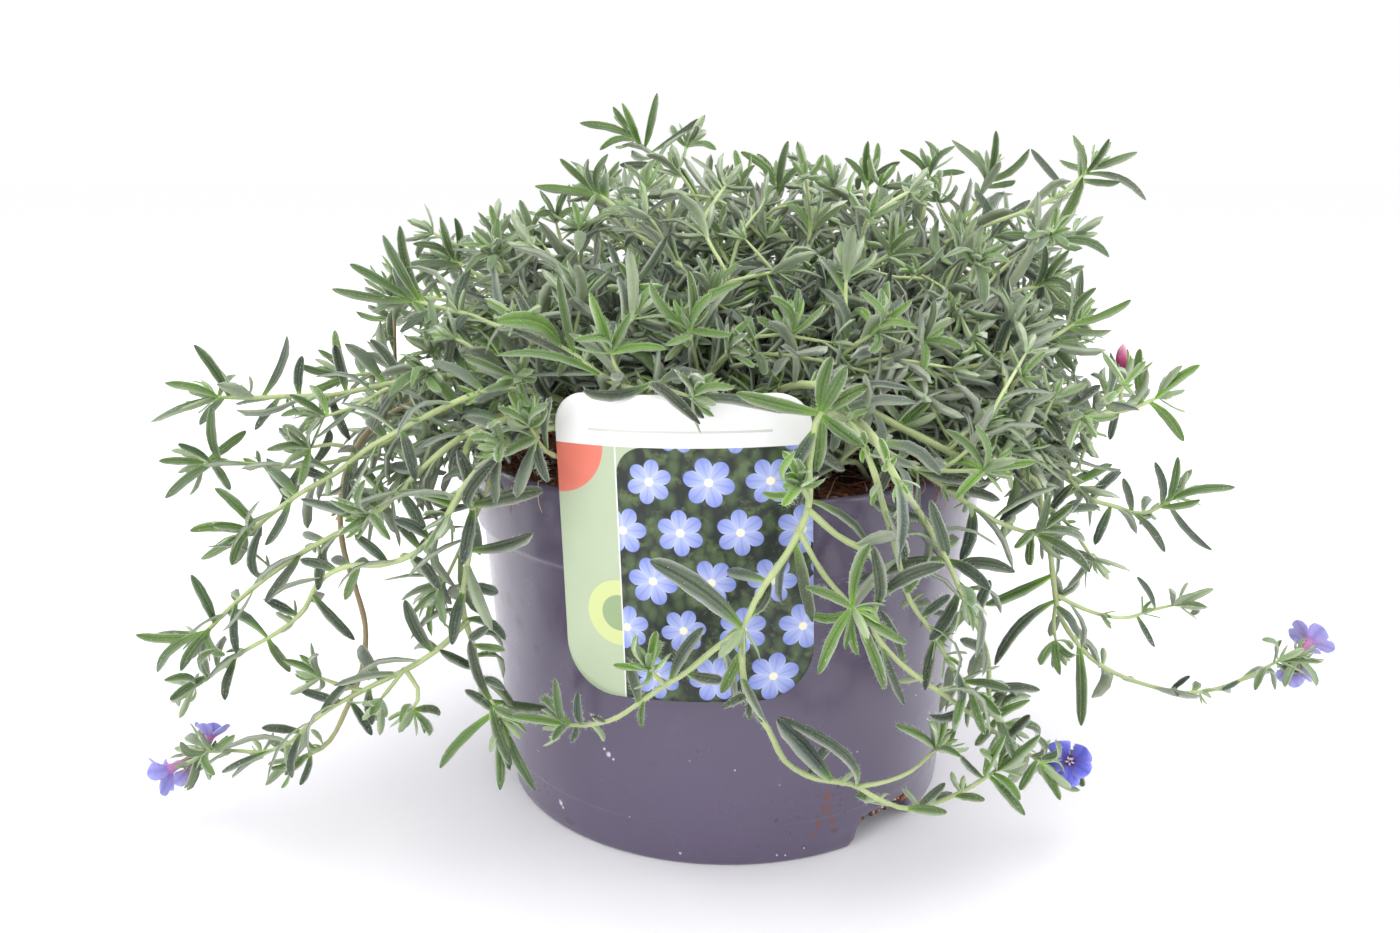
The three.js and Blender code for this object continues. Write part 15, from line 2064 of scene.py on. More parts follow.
11,0,0,8,15,99,767,-220,532,1503,30,9,17,0,-20,-93,30,819,-132,357,1487,32,12,35,0,-90,-9,42,871,-308,411,1449,25,5,54,0,32,-57,76,922,-198,423,1546,23,7,72,0,-61,-78,-13,974,-230,346,1497,23,6,91,0,-42,46,79]},
{"n": "shoot_back_4", "r": [75, 50], "o": 0, "k": 1, "f": 1, "p": [[61,471,1088],[96,498,1192],[158,567,1375],[236,571,1446]],
 "l": [142,216,499,1185,32,13,0,0,-39,17,91,186,31,424,1232,32,12,0,0,58,52,63,230,96,622,1203,31,13,0,0,32,-35,88,274,203,421,1238,31,5,0,0,-11,61,78,318,6,522,1329,33,9,0,0,84,26,47,362,173,589,1225,26,8,0,0,-10,-14,
99,406,141,433,1331,35,9,0,0,15,81,57,450,48,619,1335,27,7,0,0,70,-9,70,494,234,554,1326,27,9,0,0,-41,31,86,538,85,507,1408,28,5,0,0,61,61,51,582,178,680,1387,28,4,0,0,18,-42,89,626,217,504,1445,30,9,0,0,1,84,55,670,101,
659,1485,30,10,0,0,83,-11,54,714,287,570,1380,31,10,0,0,10,21,97,758,177,543,1504,26,12,14,0,93,35,11,802,272,645,1451,27,12,29,0,37,-74,56,846,267,514,1457,24,12,45,0,44,78,44,890,256,598,1533,22,9,61,0,87,-39,-28,934,
298,577,1453,28,8,76,0,-21,-27,94,978,271,542,1507,27,13,92,0,74,65,-16]},
{"n": "shoot_top_centre", "r": [75, 50], "o": 0, "k": 1, "f": 1, "p": [[60,-143,1304],[48,-83,1345],[26,17,1417],[-21,204,1374]],
 "l": [144,-74,-89,1389,26,9,0,0,39,85,36,193,116,47,1316,28,4,0,0,-54,26,80,242,56,-110,1447,31,12,0,0,-20,98,8,291,-33,-11,1337,28,11,0,0,43,46,78,340,151,-14,1404,32,12,0,0,-65,61,45,389,-31,-92,1454,30,8,0,0,19,92,
36,438,34,94,1333,33,13,0,0,-13,22,97,487,87,-37,1490,35,8,0,0,-50,85,16,536,-109,26,1441,28,8,0,0,45,71,55,584,120,130,1417,31,4,0,0,-73,39,56,633,-8,38,1525,28,13,0,0,-7,95,-32,682,-62,123,1310,27,11,0,0,13,78,62,731,
93,167,1466,34,3,4,0,-69,59,-41,780,-100,142,1439,25,3,21,0,38,81,-45,829,26,174,1327,32,12,39,0,-61,66,45,878,-7,212,1444,28,5,56,0,-27,49,-83,927,-84,220,1338,24,9,74,0,55,82,15,976,3,262,1365,23,12,91,0,-96,22,-19]},
{"n": "shoot_centre_right", "r": [75, 50], "o": 0, "k": 1, "f": 1, "p": [[134,-208,1271],[127,-236,1304],[125,-284,1352],[101,-325,1376]],
 "l": [164,19,-329,1329,33,5,0,0,49,-17,85,252,128,-216,1450,29,11,0,0,-18,-98,7,340,211,-359,1303,33,4,0,0,-42,-29,86,428,-15,-296,1396,34,12,0,0,53,-63,57,516,210,-261,1444,31,8,0,0,-41,-86,30,604,97,-397,1331,31,4,0,
0,9,-13,99,692,69,-274,1473,36,9,0,0,-6,-99,9,780,160,-424,1397,31,5,21,0,-90,-19,38,868,-4,-364,1389,26,3,53,0,45,-77,45,956,94,-356,1433,26,9,84,0,-64,-60,-47]},
{"n": "shoot_centre_right", "r": [75, 50], "o": 0, "k": 1, "f": 1, "p": [[157,-237,1387],[181,-286,1363],[225,-370,1340],[224,-468,1145]],
 "l": [146,218,-279,1220,27,8,0,0,26,-94,22,198,113,-401,1427,35,10,0,0,61,-50,-62,249,311,-276,1380,29,3,0,0,1,-89,-45,301,127,-346,1270,30,5,0,0,73,-68,7,353,231,-388,1453,35,10,0,0,35,-54,-76,405,289,-328,1312,28,10,
0,0,-4,-91,40,456,135,-427,1382,31,11,0,0,87,-49,-2,508,339,-340,1475,31,5,0,0,21,-92,-35,560,239,-415,1242,34,5,0,0,47,-70,54,612,210,-477,1393,35,8,0,0,46,-30,-83,664,323,-393,1280,31,4,0,0,-49,-70,-52,715,123,-371,
1258,31,6,0,0,36,-60,-71,767,253,-531,1254,33,4,17,0,-17,26,-95,819,275,-385,1135,32,8,35,0,-41,-85,-34,871,156,-481,1176,25,5,54,0,64,-8,-77,922,278,-513,1124,27,9,72,0,-72,14,-68,974,208,-462,1092,26,4,91,0,39,-92,
-7]},
{"n": "shoot_centre_right", "r": [75, 50], "o": 0, "k": 1, "f": 1, "p": [[137,-272,1272],[101,-335,1256],[34,-407,1279],[-46,-476,1223]],
 "l": [149,159,-370,1155,30,8,0,0,-72,-67,20,208,-14,-346,1283,35,7,0,0,16,-88,-44,267,152,-445,1315,35,5,0,0,-81,-45,-37,325,4,-395,1172,30,9,0,0,-13,-72,69,384,43,-347,1381,31,7,0,0,-50,-84,-22,443,119,-481,1245,32,10,
0,0,-84,-32,44,501,-84,-369,1292,29,4,0,0,4,-94,33,560,53,-454,1382,33,5,0,0,-84,-44,-33,677,-97,-386,1361,29,8,0,0,-42,-80,-43,736,53,-543,1277,27,10,6,0,-85,-26,-45,795,-89,-416,1153,27,5,27,0,-29,-95,8,853,-89,-511,
1286,27,6,48,0,-24,-21,-95,912,-23,-508,1180,25,7,69,0,-99,-9,5,971,-113,-477,1207,26,8,90,0,21,-86,-47]},
{"n": "shoot_right_fan", "r": [75, 50], "o": 0, "k": 1, "f": 1, "p": [[378,-189,1222],[413,-227,1226],[458,-262,1234],[531,-339,1164]],
 "l": [154,452,-285,1120,33,5,0,0,54,-50,68,222,400,-312,1333,33,12,0,0,82,-43,-38,289,548,-221,1235,28,5,0,0,0,-100,6,357,437,-387,1201,27,5,0,0,90,5,44,425,468,-239,1356,27,6,0,0,69,-68,-26,492,541,-256,1181,32,12,0,0,
29,-60,75,560,459,-369,1294,36,10,0,0,97,3,-24,628,565,-212,1288,26,7,0,0,47,-81,-34,695,473,-334,1122,29,5,0,0,88,-36,31,763,526,-382,1294,32,5,15,0,49,-35,-80,831,578,-289,1134,28,4,40,0,-3,-99,-16,898,512,-410,1131,
29,7,64,0,93,22,-30,966,587,-368,1166,22,10,88,0,-26,-31,-92]},
{"n": "shoot_left_top", "r": [75, 50], "o": 0, "k": 1, "f": 1, "p": [[-262,-274,1307],[-301,-218,1360],[-361,-113,1452],[-466,52,1419]],
 "l": [143,-229,-167,1447,32,8,0,0,-93,36,12,189,-377,-263,1399,28,12,0,0,6,94,34,236,-295,-87,1328,28,9,0,0,-53,5,85,282,-274,-244,1457,29,10,0,0,-57,80,22,328,-409,-186,1353,32,9,0,0,14,61,78,375,-239,-132,1413,27,12,
0,0,-74,35,58,421,-371,-233,1483,28,11,0,0,-9,95,31,467,-375,-66,1386,30,5,0,0,-11,8,99,514,-281,-135,1539,26,7,0,0,-76,63,13,560,-441,-135,1476,33,13,0,0,34,83,45,606,-293,12,1426,34,5,0,0,-73,33,59,653,-393,-110,1569,
30,5,0,0,-42,88,-20,699,-476,-69,1338,26,12,0,0,-24,86,45,745,-318,57,1510,32,9,9,0,-81,51,-29,792,-506,-47,1487,28,6,26,0,-7,91,-41,838,-406,24,1366,23,3,42,0,-73,57,37,884,-454,61,1473,24,13,59,0,-42,30,-86,931,-523,
46,1392,21,12,75,0,30,95,12,977,-460,126,1407,23,4,92,0,-99,-4,-12]},
{"n": "shoot_top_front", "r": [75, 50], "o": 0, "k": 1, "f": 1, "p": [[106,-108,1056],[130,-121,1131],[165,-114,1250],[210,-155,1318]],
 "l": [149,277,-123,1135,32,7,0,0,-29,-24,93,208,85,-198,1183,32,8,0,0,68,36,64,267,117,-15,1196,35,10,0,0,37,-56,74,325,258,-167,1203,29,12,0,0,-42,24,88,384,96,-177,1280,34,5,0,0,71,55,44,443,146,-20,1222,35,10,0,0,27,
-47,84,501,259,-199,1275,28,8,0,0,-21,54,81,560,87,-91,1327,34,5,0,0,86,-6,51,619,293,-92,1284,33,13,0,0,-32,-17,93,677,129,-197,1388,34,5,0,0,86,29,41,736,270,-36,1365,26,13,6,0,15,-82,55,795,223,-219,1308,25,11,27,0,
31,40,86,853,188,-144,1382,23,10,48,0,75,-65,-5,912,282,-174,1341,28,8,69,0,-51,-55,66,971,221,-225,1385,20,11,90,0,90,39,21]},
{"n": "shoot_top_front", "r": [75, 50], "o": 0, "k": 1, "f": 1, "p": [[109,-112,1077],[139,-158,1109],[185,-215,1170],[243,-325,1136]],
 "l": [151,247,-140,1188,28,6,0,0,-11,-99,6,277,97,-150,1244,33,13,0,0,63,-76,16,340,260,-193,1144,33,10,0,0,-38,-65,66,403,116,-295,1194,28,11,0,0,81,12,57,466,199,-130,1274,31,7,0,0,33,-92,21,529,281,-303,1150,35,4,0,
0,-5,-5,100,591,142,-252,1255,28,9,0,0,88,-46,4,654,301,-201,1194,36,10,0,0,7,-99,11,717,161,-345,1099,31,4,0,0,87,-42,28,780,259,-331,1264,29,12,21,0,29,-65,-70,843,289,-279,1071,25,6,44,0,4,-99,14,906,217,-394,1138,24,
7,66,0,87,-3,-49,969,314,-356,1159,21,11,89,0,-23,-73,-65]},
{"n": "shoot_back_6", "r": [75, 50], "o": 0, "k": 1, "f": 1, "p": [[453,557,1328],[411,613,1345],[362,689,1397],[316,805,1333]],
 "l": [149,452,688,1403,34,12,0,0,-92,31,-25,208,313,597,1391,27,6,0,0,1,100,-9,267,426,744,1252,34,9,0,0,-65,42,63,325,419,635,1491,35,6,0,0,-63,77,-10,384,283,644,1349,33,7,0,0,9,68,73,443,457,742,1409,32,8,0,0,-81,24,
54,501,325,617,1492,29,10,0,0,-22,96,14,560,287,804,1352,32,8,0,0,-11,17,98,619,416,742,1502,27,5,0,0,-69,71,-13,677,213,747,1394,32,4,0,0,35,93,-13,736,411,783,1321,32,5,6,0,-79,61,-4,795,290,828,1435,24,8,27,0,-8,45,
-89,853,283,788,1279,28,5,48,0,21,94,26,912,350,857,1334,25,4,69,0,-79,7,-61,971,241,849,1338,26,12,90,0,41,58,-70]},
{"n": "shoot_left_top", "r": [75, 50], "o": 0, "k": 1, "f": 1, "p": [[-231,-138,1134],[-224,-180,1196],[-214,-229,1287],[-185,-293,1351]],
 "l": [149,-274,-301,1208,35,10,0,0,46,14,88,208,-242,-131,1279,33,5,0,0,21,-93,31,267,-104,-277,1229,30,9,0,0,-48,-18,86,325,-314,-236,1269,31,11,0,0,72,-30,63,384,-149,-138,1320,31,5,0,0,-27,-80,53,443,-208,-329,1240,
34,11,0,0,2,12,99,501,-303,-165,1359,32,4,0,0,46,-69,55,560,-101,-250,1358,36,5,0,0,-66,-43,62,619,-267,-340,1344,29,4,0,0,66,16,74,677,-202,-200,1401,33,7,0,0,19,-95,24,736,-118,-326,1299,30,7,6,0,-23,-28,93,795,-251,
-326,1405,28,3,27,0,92,-35,18,853,-120,-275,1412,29,4,48,0,-27,-95,13,912,-182,-354,1339,27,11,69,0,34,10,93,971,-197,-309,1442,26,6,90,0,60,-79,-12]},
{"n": "shoot_top_mid", "r": [75, 50], "o": 0, "k": 1, "f": 1, "p": [[60,196,1133],[79,231,1177],[113,315,1269],[137,394,1260]],
 "l": [151,155,306,1128,33,6,0,0,1,22,98,214,100,170,1259,33,12,0,0,23,91,34,277,7,340,1217,29,8,0,0,73,15,66,340,193,258,1199,29,5,0,0,-27,59,76,403,59,253,1314,27,10,0,0,59,80,8,466,106,379,1239,35,3,0,0,24,-22,94,529,
205,264,1357,34,5,0,0,-24,92,32,591,31,351,1325,34,4,0,0,76,52,39,654,203,407,1248,29,6,0,0,-29,45,84,717,154,390,1374,32,7,0,0,15,82,-56,780,42,431,1210,31,8,21,0,68,72,16,843,234,431,1250,24,3,44,0,-58,78,-23,906,115,
441,1296,29,7,66,0,53,44,-73,969,150,439,1205,27,11,89,0,23,68,69]},
{"n": "shoot_right_level", "r": [75, 50], "o": 0, "k": 1, "f": 1, "p": [[300,-506,1256],[370,-523,1254],[451,-550,1258],[586,-514,1179]],
 "l": [149,435,-529,1374,34,10,0,0,72,-19,-66,208,455,-451,1163,34,12,0,0,68,-61,41,325,467,-430,1353,32,10,0,0,78,-57,-25,384,467,-608,1138,28,10,0,0,73,-18,66,443,387,-608,1410,32,10,0,0,94,-32,-12,501,503,-460,1246,
35,8,0,0,64,-74,22,677,484,-506,1133,31,7,0,0,97,-14,18,736,588,-613,1267,29,6,6,0,46,58,-67,795,538,-427,1237,32,12,27,0,77,-25,-58,853,574,-572,1120,29,7,48,0,72,69,10,912,655,-501,1220,25,12,69,0,13,15,-98,971,602,
-470,1138,20,8,90,0,88,-48,6]},
{"n": "shoot_top_front", "r": [75, 50], "o": 0, "k": 1, "f": 1, "p": [[217,-201,1127],[263,-212,1155],[328,-206,1234],[382,-206,1323]],
 "l": [151,286,-205,1288,27,12,0,0,89,-37,-29,214,373,-185,1126,31,9,0,0,20,-53,83,277,279,-315,1222,27,6,0,0,85,43,32,340,286,-135,1247,28,8,0,0,78,-55,29,403,430,-239,1190,28,7,0,0,-9,26,96,466,247,-265,1320,36,13,0,0,
89,28,37,529,353,-117,1230,29,11,0,0,42,-50,75,591,390,-291,1266,32,11,0,0,26,67,69,654,300,-162,1356,36,5,0,0,93,-24,28,717,495,-171,1270,27,12,0,0,-11,-17,98,780,358,-258,1361,33,10,21,0,74,63,26,843,396,-138,1380,31,
5,44,0,45,-81,39,906,449,-248,1354,26,6,66,0,-25,57,78,969,378,-209,1402,25,11,89,0,100,4,-1]},
{"n": "shoot_top_fan", "r": [75, 50], "o": 0, "k": 1, "f": 1, "p": [[-73,-225,1075],[-24,-236,1103],[49,-226,1140],[165,-247,1128]],
 "l": [277,-21,-170,1223,27,11,0,0,93,-36,10,403,10,-304,1202,32,10,0,0,84,51,20,466,19,-107,1172,29,4,0,0,86,-30,41,591,77,-217,1255,34,11,0,0,92,8,-37,717,138,-329,1167,33,3,0,0,81,54,-22,780,165,-156,1208,33,4,21,0,
79,-48,-38,843,175,-267,1059,24,4,44,0,77,5,64,906,230,-291,1181,25,5,66,0,52,23,-82,969,241,-198,1111,27,5,89,0,48,-88,2]},
{"n": "shoot_left_front", "r": [75, 50], "o": 0, "k": 1, "f": 1, "p": [[-550,-517,1148],[-620,-509,1130],[-704,-518,1121],[-801,-450,998]],
 "l": [147,-615,-393,1174,36,8,0,0,-92,-16,-37,203,-682,-622,1197,34,5,0,0,-80,42,-43,312,-680,-472,1224,27,5,0,0,-84,-11,-54,367,-690,-604,1102,34,9,0,0,-84,50,20,422,-786,-431,1129,35,8,0,0,-49,-86,16,477,-684,-581,
1244,28,3,0,0,-96,-5,-28,532,-712,-551,1036,30,7,0,0,-90,-8,44,588,-798,-443,1179,32,11,0,0,-60,-50,-63,642,-793,-623,1118,36,10,0,0,-61,60,-52,752,-812,-449,1131,32,8,12,0,-27,16,-95,807,-791,-581,965,27,5,31,0,-45,79,
-42,863,-757,-374,1006,30,10,51,0,-73,-26,-63,917,-886,-452,1006,23,4,71,0,26,46,-85,973,-811,-433,917,26,5,90,0,-86,44,27]},
{"n": "shoot_back_8", "r": [75, 50], "o": 0, "k": 1, "f": 1, "p": [[-523,202,1193],[-598,238,1213],[-728,274,1267],[-811,346,1203]],
 "l": [147,-627,312,1133,35,5,0,0,-68,-2,73,203,-593,276,1343,26,5,0,0,-91,29,-30,258,-721,192,1201,29,11,0,0,-24,87,43,312,-608,369,1219,33,12,0,0,-94,-13,31,367,-645,185,1341,32,6,0,0,-87,50,-3,422,-767,255,1133,27,8,
0,0,-55,19,81,477,-649,337,1342,35,11,0,0,-99,-11,13,532,-776,143,1310,35,10,0,0,-65,71,27,588,-782,399,1209,34,7,0,0,-76,-24,60,642,-770,287,1370,35,13,0,0,-81,36,-46,698,-820,250,1189,29,8,0,0,-52,81,27,752,-767,398,
1244,34,6,12,0,-85,-18,-49,807,-883,310,1264,26,5,31,0,-6,65,-76,863,-797,356,1128,26,12,51,0,-80,51,32,917,-834,404,1222,22,12,71,0,-31,-17,-94,973,-882,347,1163,26,5,90,0,21,96,-21]},
{"n": "shoot_top_front", "r": [75, 50], "o": 0, "k": 1, "f": 1, "p": [[122,-125,1141],[163,-166,1156],[200,-207,1181],[307,-305,1115]],
 "l": [151,164,-298,1082,30,12,0,0,80,-13,59,214,192,-196,1257,28,5,0,0,63,-59,-50,277,313,-187,1113,36,7,0,0,2,-78,62,340,154,-273,1206,33,4,0,0,99,-3,14,403,249,-120,1289,32,13,0,0,23,-94,25,466,257,-319,1169,26,8,0,0,
10,6,99,529,140,-241,1326,29,5,0,0,84,-54,3,591,339,-153,1184,27,4,0,0,25,-94,25,654,156,-325,1126,33,8,0,0,94,-33,3,717,332,-282,1258,36,12,0,0,30,-50,-82,780,269,-212,1069,30,12,21,0,57,-82,2,843,269,-363,1156,28,8,44,
0,76,9,-64,906,369,-275,1137,27,10,66,0,1,-80,-61,969,316,-342,1065,26,13,89,0,90,-15,42]},
{"n": "shoot_right_level", "r": [75, 50], "o": 0, "k": 1, "f": 1, "p": [[291,-446,1221],[261,-487,1237],[201,-544,1290],[55,-606,1246]],
 "l": [149,177,-440,1339,31,8,0,0,-29,-95,-6,208,326,-579,1264,26,13,0,0,-91,-38,16,267,109,-517,1201,27,4,0,0,6,-75,66,325,270,-489,1401,35,5,0,0,-68,-73,2,384,232,-605,1259,26,10,0,0,-50,22,84,443,131,-447,1326,35,4,0,
0,-9,-84,53,501,284,-574,1358,35,12,0,0,-92,-31,25,560,123,-591,1271,33,11,0,0,7,-23,97,619,154,-519,1404,29,4,0,0,-65,-73,-24,677,181,-654,1275,34,4,0,0,-98,14,11,736,88,-493,1248,32,6,6,0,-57,-82,-3,795,81,-634,1350,
31,8,27,0,-67,-6,-74,912,-14,-569,1276,30,7,69,0,-23,-73,-64]},
{"n": "shoot_back_6", "r": [75, 50], "o": 0, "k": 1, "f": 1, "p": [[370,369,1140],[367,420,1160],[356,496,1192],[308,578,1177]],
 "l": [154,231,473,1131,33,9,0,0,41,79,46,222,466,467,1158,29,6,0,0,-53,75,39,289,297,419,1304,36,10,0,0,10,100,0,357,337,518,1106,26,8,0,0,8,53,85,425,424,481,1252,31,5,0,0,-54,84,-4,492,243,480,1225,31,10,0,0,32,89,34,
560,440,608,1135,33,5,0,0,-51,53,68,628,355,509,1341,30,4,0,0,-27,95,-15,695,261,535,1134,28,11,0,0,8,92,39,763,389,627,1202,31,3,15,0,-89,39,-23,831,240,586,1226,29,12,40,0,13,75,-65,898,297,612,1117,26,7,64,0,-53,52,
67,966,285,665,1212,24,3,88,0,-53,14,-84]},
{"n": "shoot_top_centre", "r": [75, 50], "o": 0, "k": 1, "f": 1, "p": [[-9,-38,1559],[49,-6,1594],[164,-12,1697],[365,40,1628]],
 "l": [143,2,79,1682,36,12,0,0,97,21,-9,189,143,33,1487,30,7,0,0,42,38,82,236,79,-49,1708,30,8,0,0,72,68,-9,421,219,20,1647,35,3,0,0,-12,-30,95,467,95,-113,1760,30,4,0,0,81,48,35,653,247,80,1673,34,11,0,0,70,-57,43,792,
272,20,1559,31,5,26,0,92,20,32,838,343,-21,1709,30,3,42,0,52,50,-69,884,339,93,1639,28,4,59,0,74,-57,-36,931,392,1,1590,25,12,75,0,47,87,18,977,427,62,1660,20,6,92,0,33,1,-94]},
{"n": "shoot_back_8", "r": [75, 50], "o": 0, "k": 1, "f": 1, "p": [[-694,271,1311],[-738,312,1267],[-756,362,1198],[-797,440,1053]],
 "l": [146,-686,409,1239,28,8,0,0,-92,5,-38,198,-827,328,1317,26,9,0,0,-11,47,-87,249,-727,273,1171,31,12,0,0,-63,75,-20,301,-737,425,1273,35,12,0,0,-54,0,-84,353,-885,332,1206,35,4,0,0,33,70,-64,405,-655,338,1153,35,10,
0,0,-63,64,-45,456,-794,485,1270,28,9,0,0,-4,13,-99,508,-835,313,1099,27,4,0,0,25,92,-31,560,-648,462,1152,31,13,0,0,-70,17,-69,612,-853,413,1198,28,5,0,0,33,30,-89,664,-707,310,1082,27,7,0,0,-42,75,-51,715,-752,536,
1210,35,11,0,0,-26,18,-95,767,-857,352,1102,34,8,17,0,20,70,-69,819,-708,448,1044,27,4,35,0,-85,22,-48,871,-870,502,1107,24,11,54,0,15,8,-99,922,-809,402,976,29,11,72,0,-14,98,-14,974,-786,504,1013,20,7,91,0,-59,-44,
-68]},
{"n": "shoot_right_bud", "r": [75, 50], "o": 0, "k": 1, "f": 1, "p": [[381,-469,1146],[431,-434,1143],[524,-391,1213],[675,-225,1269]],
 "l": [143,472,-349,1238,34,6,0,0,62,26,-74,236,519,-461,1188,27,8,0,0,30,89,-35,282,434,-315,1199,28,4,0,0,99,-4,-13,328,550,-445,1076,32,10,0,0,44,56,70,375,426,-467,1313,31,4,0,0,89,42,17,421,525,-283,1158,35,7,0,0,
60,-32,74,514,472,-349,1315,32,5,0,0,99,-9,6,560,618,-349,1138,34,6,0,0,31,11,94,606,567,-478,1338,33,12,0,0,62,77,11,653,517,-290,1246,26,8,0,0,97,-6,23,699,647,-377,1197,36,5,0,0,9,81,58,745,579,-320,1335,31,9,9,0,69,
62,-38,792,615,-219,1203,32,5,26,0,69,-3,72,838,727,-323,1300,29,10,42,0,9,99,-5,884,609,-193,1318,29,9,59,0,93,27,-23,931,721,-206,1220,26,7,75,0,5,50,86,977,702,-219,1317,22,6,92,0,35,79,-51]},
{"n": "shoot_top_right_3", "r": [75, 50], "o": 0, "k": 1, "f": 1, "p": [[407,69,1200],[456,18,1249],[522,-35,1310],[586,-174,1332]],
 "l": [146,487,-71,1188,33,6,0,0,37,-7,92,198,403,15,1347,32,8,0,0,81,-57,10,249,566,40,1258,30,7,0,0,-5,-80,59,301,449,-110,1282,32,8,0,0,83,14,54,353,505,48,1410,31,6,0,0,58,-81,0,405,622,-55,1273,36,5,0,0,-14,-17,97,
456,433,-94,1392,34,11,0,0,95,-8,30,508,589,52,1363,31,5,0,0,23,-91,34,560,530,-120,1271,33,5,0,0,59,-1,81,612,526,-49,1466,30,7,0,0,71,-68,-18,664,683,-80,1275,35,6,0,0,-8,-77,64,715,483,-169,1352,30,4,0,0,93,-35,8,767,
624,-78,1403,27,8,17,0,11,-97,-20,819,580,-185,1250,25,6,35,0,32,-52,79,871,548,-175,1387,28,5,54,0,63,-63,-46,922,639,-193,1337,25,5,72,0,-62,-79,0,974,566,-263,1319,27,6,91,0,91,-18,36]},
{"n": "shoot_top_fan", "r": [75, 50], "o": 0, "k": 1, "f": 1, "p": [[-47,-298,1217],[-78,-324,1222],[-149,-345,1252],[-249,-374,1196]],
 "l": [154,-85,-391,1142,31,5,0,0,-70,-36,61,222,-207,-278,1309,35,11,0,0,-37,-91,-19,289,-105,-469,1298,29,12,0,0,-98,16,-12,357,-191,-320,1197,28,8,0,0,-23,-54,81,425,-79,-300,1377,35,8,0,0,-91,-37,17,492,-213,-470,
1255,26,8,0,0,-56,51,66,560,-201,-254,1272,34,7,0,0,-65,-69,32,628,-192,-422,1346,35,11,0,0,-90,12,-41,763,-298,-300,1306,29,13,15,0,-56,-44,-70,831,-230,-444,1202,26,4,40,0,-78,45,-44,966,-315,-399,1211,24,9,88,0,-14,7,
-99]},
{"n": "shoot_right_fan", "r": [75, 50], "o": 0, "k": 1, "f": 1, "p": [[463,-257,1370],[541,-233,1381],[652,-215,1400],[756,-115,1338]],
 "l": [198,597,-235,1301,26,10,0,0,58,36,74,249,593,-264,1477,34,6,0,0,75,51,-43,301,598,-102,1377,26,5,0,0,88,-43,21,353,669,-305,1379,36,4,0,0,48,81,34,456,693,-181,1319,28,6,0,0,59,-23,77,508,683,-341,1497,34,7,0,0,
84,54,-11,560,684,-123,1456,27,8,0,0,86,-49,-15,612,766,-245,1331,27,10,0,0,45,63,63,664,740,-198,1540,30,13,0,0,73,44,-52,715,689,-71,1312,29,3,0,0,99,-7,14,767,780,-222,1370,34,9,17,0,23,91,-35,819,715,-68,1426,29,8,
35,0,64,24,-73,871,756,-113,1263,29,12,54,0,59,63,50,922,805,-106,1365,25,6,72,0,-12,54,-83,974,755,-34,1319,22,9,91,0,93,-17,-33]},
{"n": "shoot_left_top", "r": [75, 50], "o": 0, "k": 1, "f": 1, "p": [[-239,-177,1190],[-217,-213,1232],[-167,-259,1309],[-118,-305,1329]],
 "l": [154,-249,-144,1361,28,11,0,0,42,-85,32,222,-99,-255,1207,28,10,0,0,-14,-47,87,289,-279,-321,1324,31,4,0,0,90,-9,42,357,-153,-177,1344,35,7,0,0,16,-95,26,425,-108,-358,1252,35,11,0,0,12,9,99,492,-269,-256,1416,33,
9,0,0,84,-40,37,560,-27,-192,1336,27,10,0,0,1,-70,71,628,-158,-402,1359,30,12,0,0,72,31,62,695,-132,-246,1425,35,12,0,0,58,-81,-4,763,-48,-324,1276,29,4,15,0,11,-50,86,831,-131,-372,1380,26,6,40,0,95,-7,-30,898,-28,-308,
1368,26,7,64,0,-5,-96,-26,966,-70,-388,1318,27,9,88,0,60,28,75]},
{"n": "shoot_right_bud", "r": [75, 50], "o": 0, "k": 1, "f": 1, "p": [[657,-465,1233],[663,-503,1206],[672,-559,1189],[645,-614,1138]],
 "l": [160,750,-568,1219,26,4,0,0,-41,-43,-80,240,627,-473,1087,33,4,0,0,26,-94,-20,400,778,-545,1169,29,13,0,0,-30,-95,-10,480,566,-607,1152,31,7,0,0,62,-78,-4,560,723,-641,1271,35,7,0,0,-12,-63,-76,640,725,-570,1037,
33,11,0,0,-25,-97,1,720,525,-613,1214,32,9,0,0,6,-70,-71,800,714,-710,1148,30,5,29,0,-71,-16,-68,880,616,-584,1079,25,8,57,0,-11,-99,-7,960,594,-687,1142,25,6,86,0,10,-4,-99]},
{"n": "shoot_right_bud", "r": [75, 50], "o": 0, "k": 1, "f": 1, "p": [[615,-467,1248],[659,-481,1214],[706,-540,1184],[749,-574,1088]],
 "l": [222,635,-397,1094,27,7,0,0,84,-45,-31,289,687,-605,1219,34,8,0,0,72,19,-66,425,671,-566,1116,27,11,0,0,81,-47,36,560,827,-489,1116,36,7,0,0,17,-98,-11,628,618,-651,1153,30,6,0,0,78,-39,-49,763,683,-504,1027,33,9,
15,0,66,-63,-40,831,758,-649,1107,29,7,40,0,22,41,-88,898,798,-530,1070,30,8,64,0,-17,-70,-69,966,722,-597,1039,23,8,88,0,93,3,-37]},
{"n": "shoot_top_mid", "r": [75, 50], "o": 0, "k": 1, "f": 1, "p": [[128,105,1370],[160,74,1405],[216,42,1469],[265,-25,1464]],
 "l": [157,163,88,1546,30,12,0,0,63,-77,-9,230,265,68,1360,35,9,0,0,15,-54,83,303,149,-45,1509,27,10,0,0,95,16,25,377,234,130,1534,32,10,0,0,38,-90,22,450,293,-27,1446,33,8,0,0,4,24,97,523,121,31,1584,34,10,0,0,88,-25,
39,597,347,107,1488,36,11,0,0,15,-74,66,670,175,-100,1461,31,12,0,0,87,-28,40,743,316,-8,1584,35,10,8,0,32,-79,-52,817,288,-14,1386,32,6,35,0,33,-82,47,890,262,-107,1494,29,10,61,0,77,-6,-64,963,324,-49,1472,25,4,87,0,
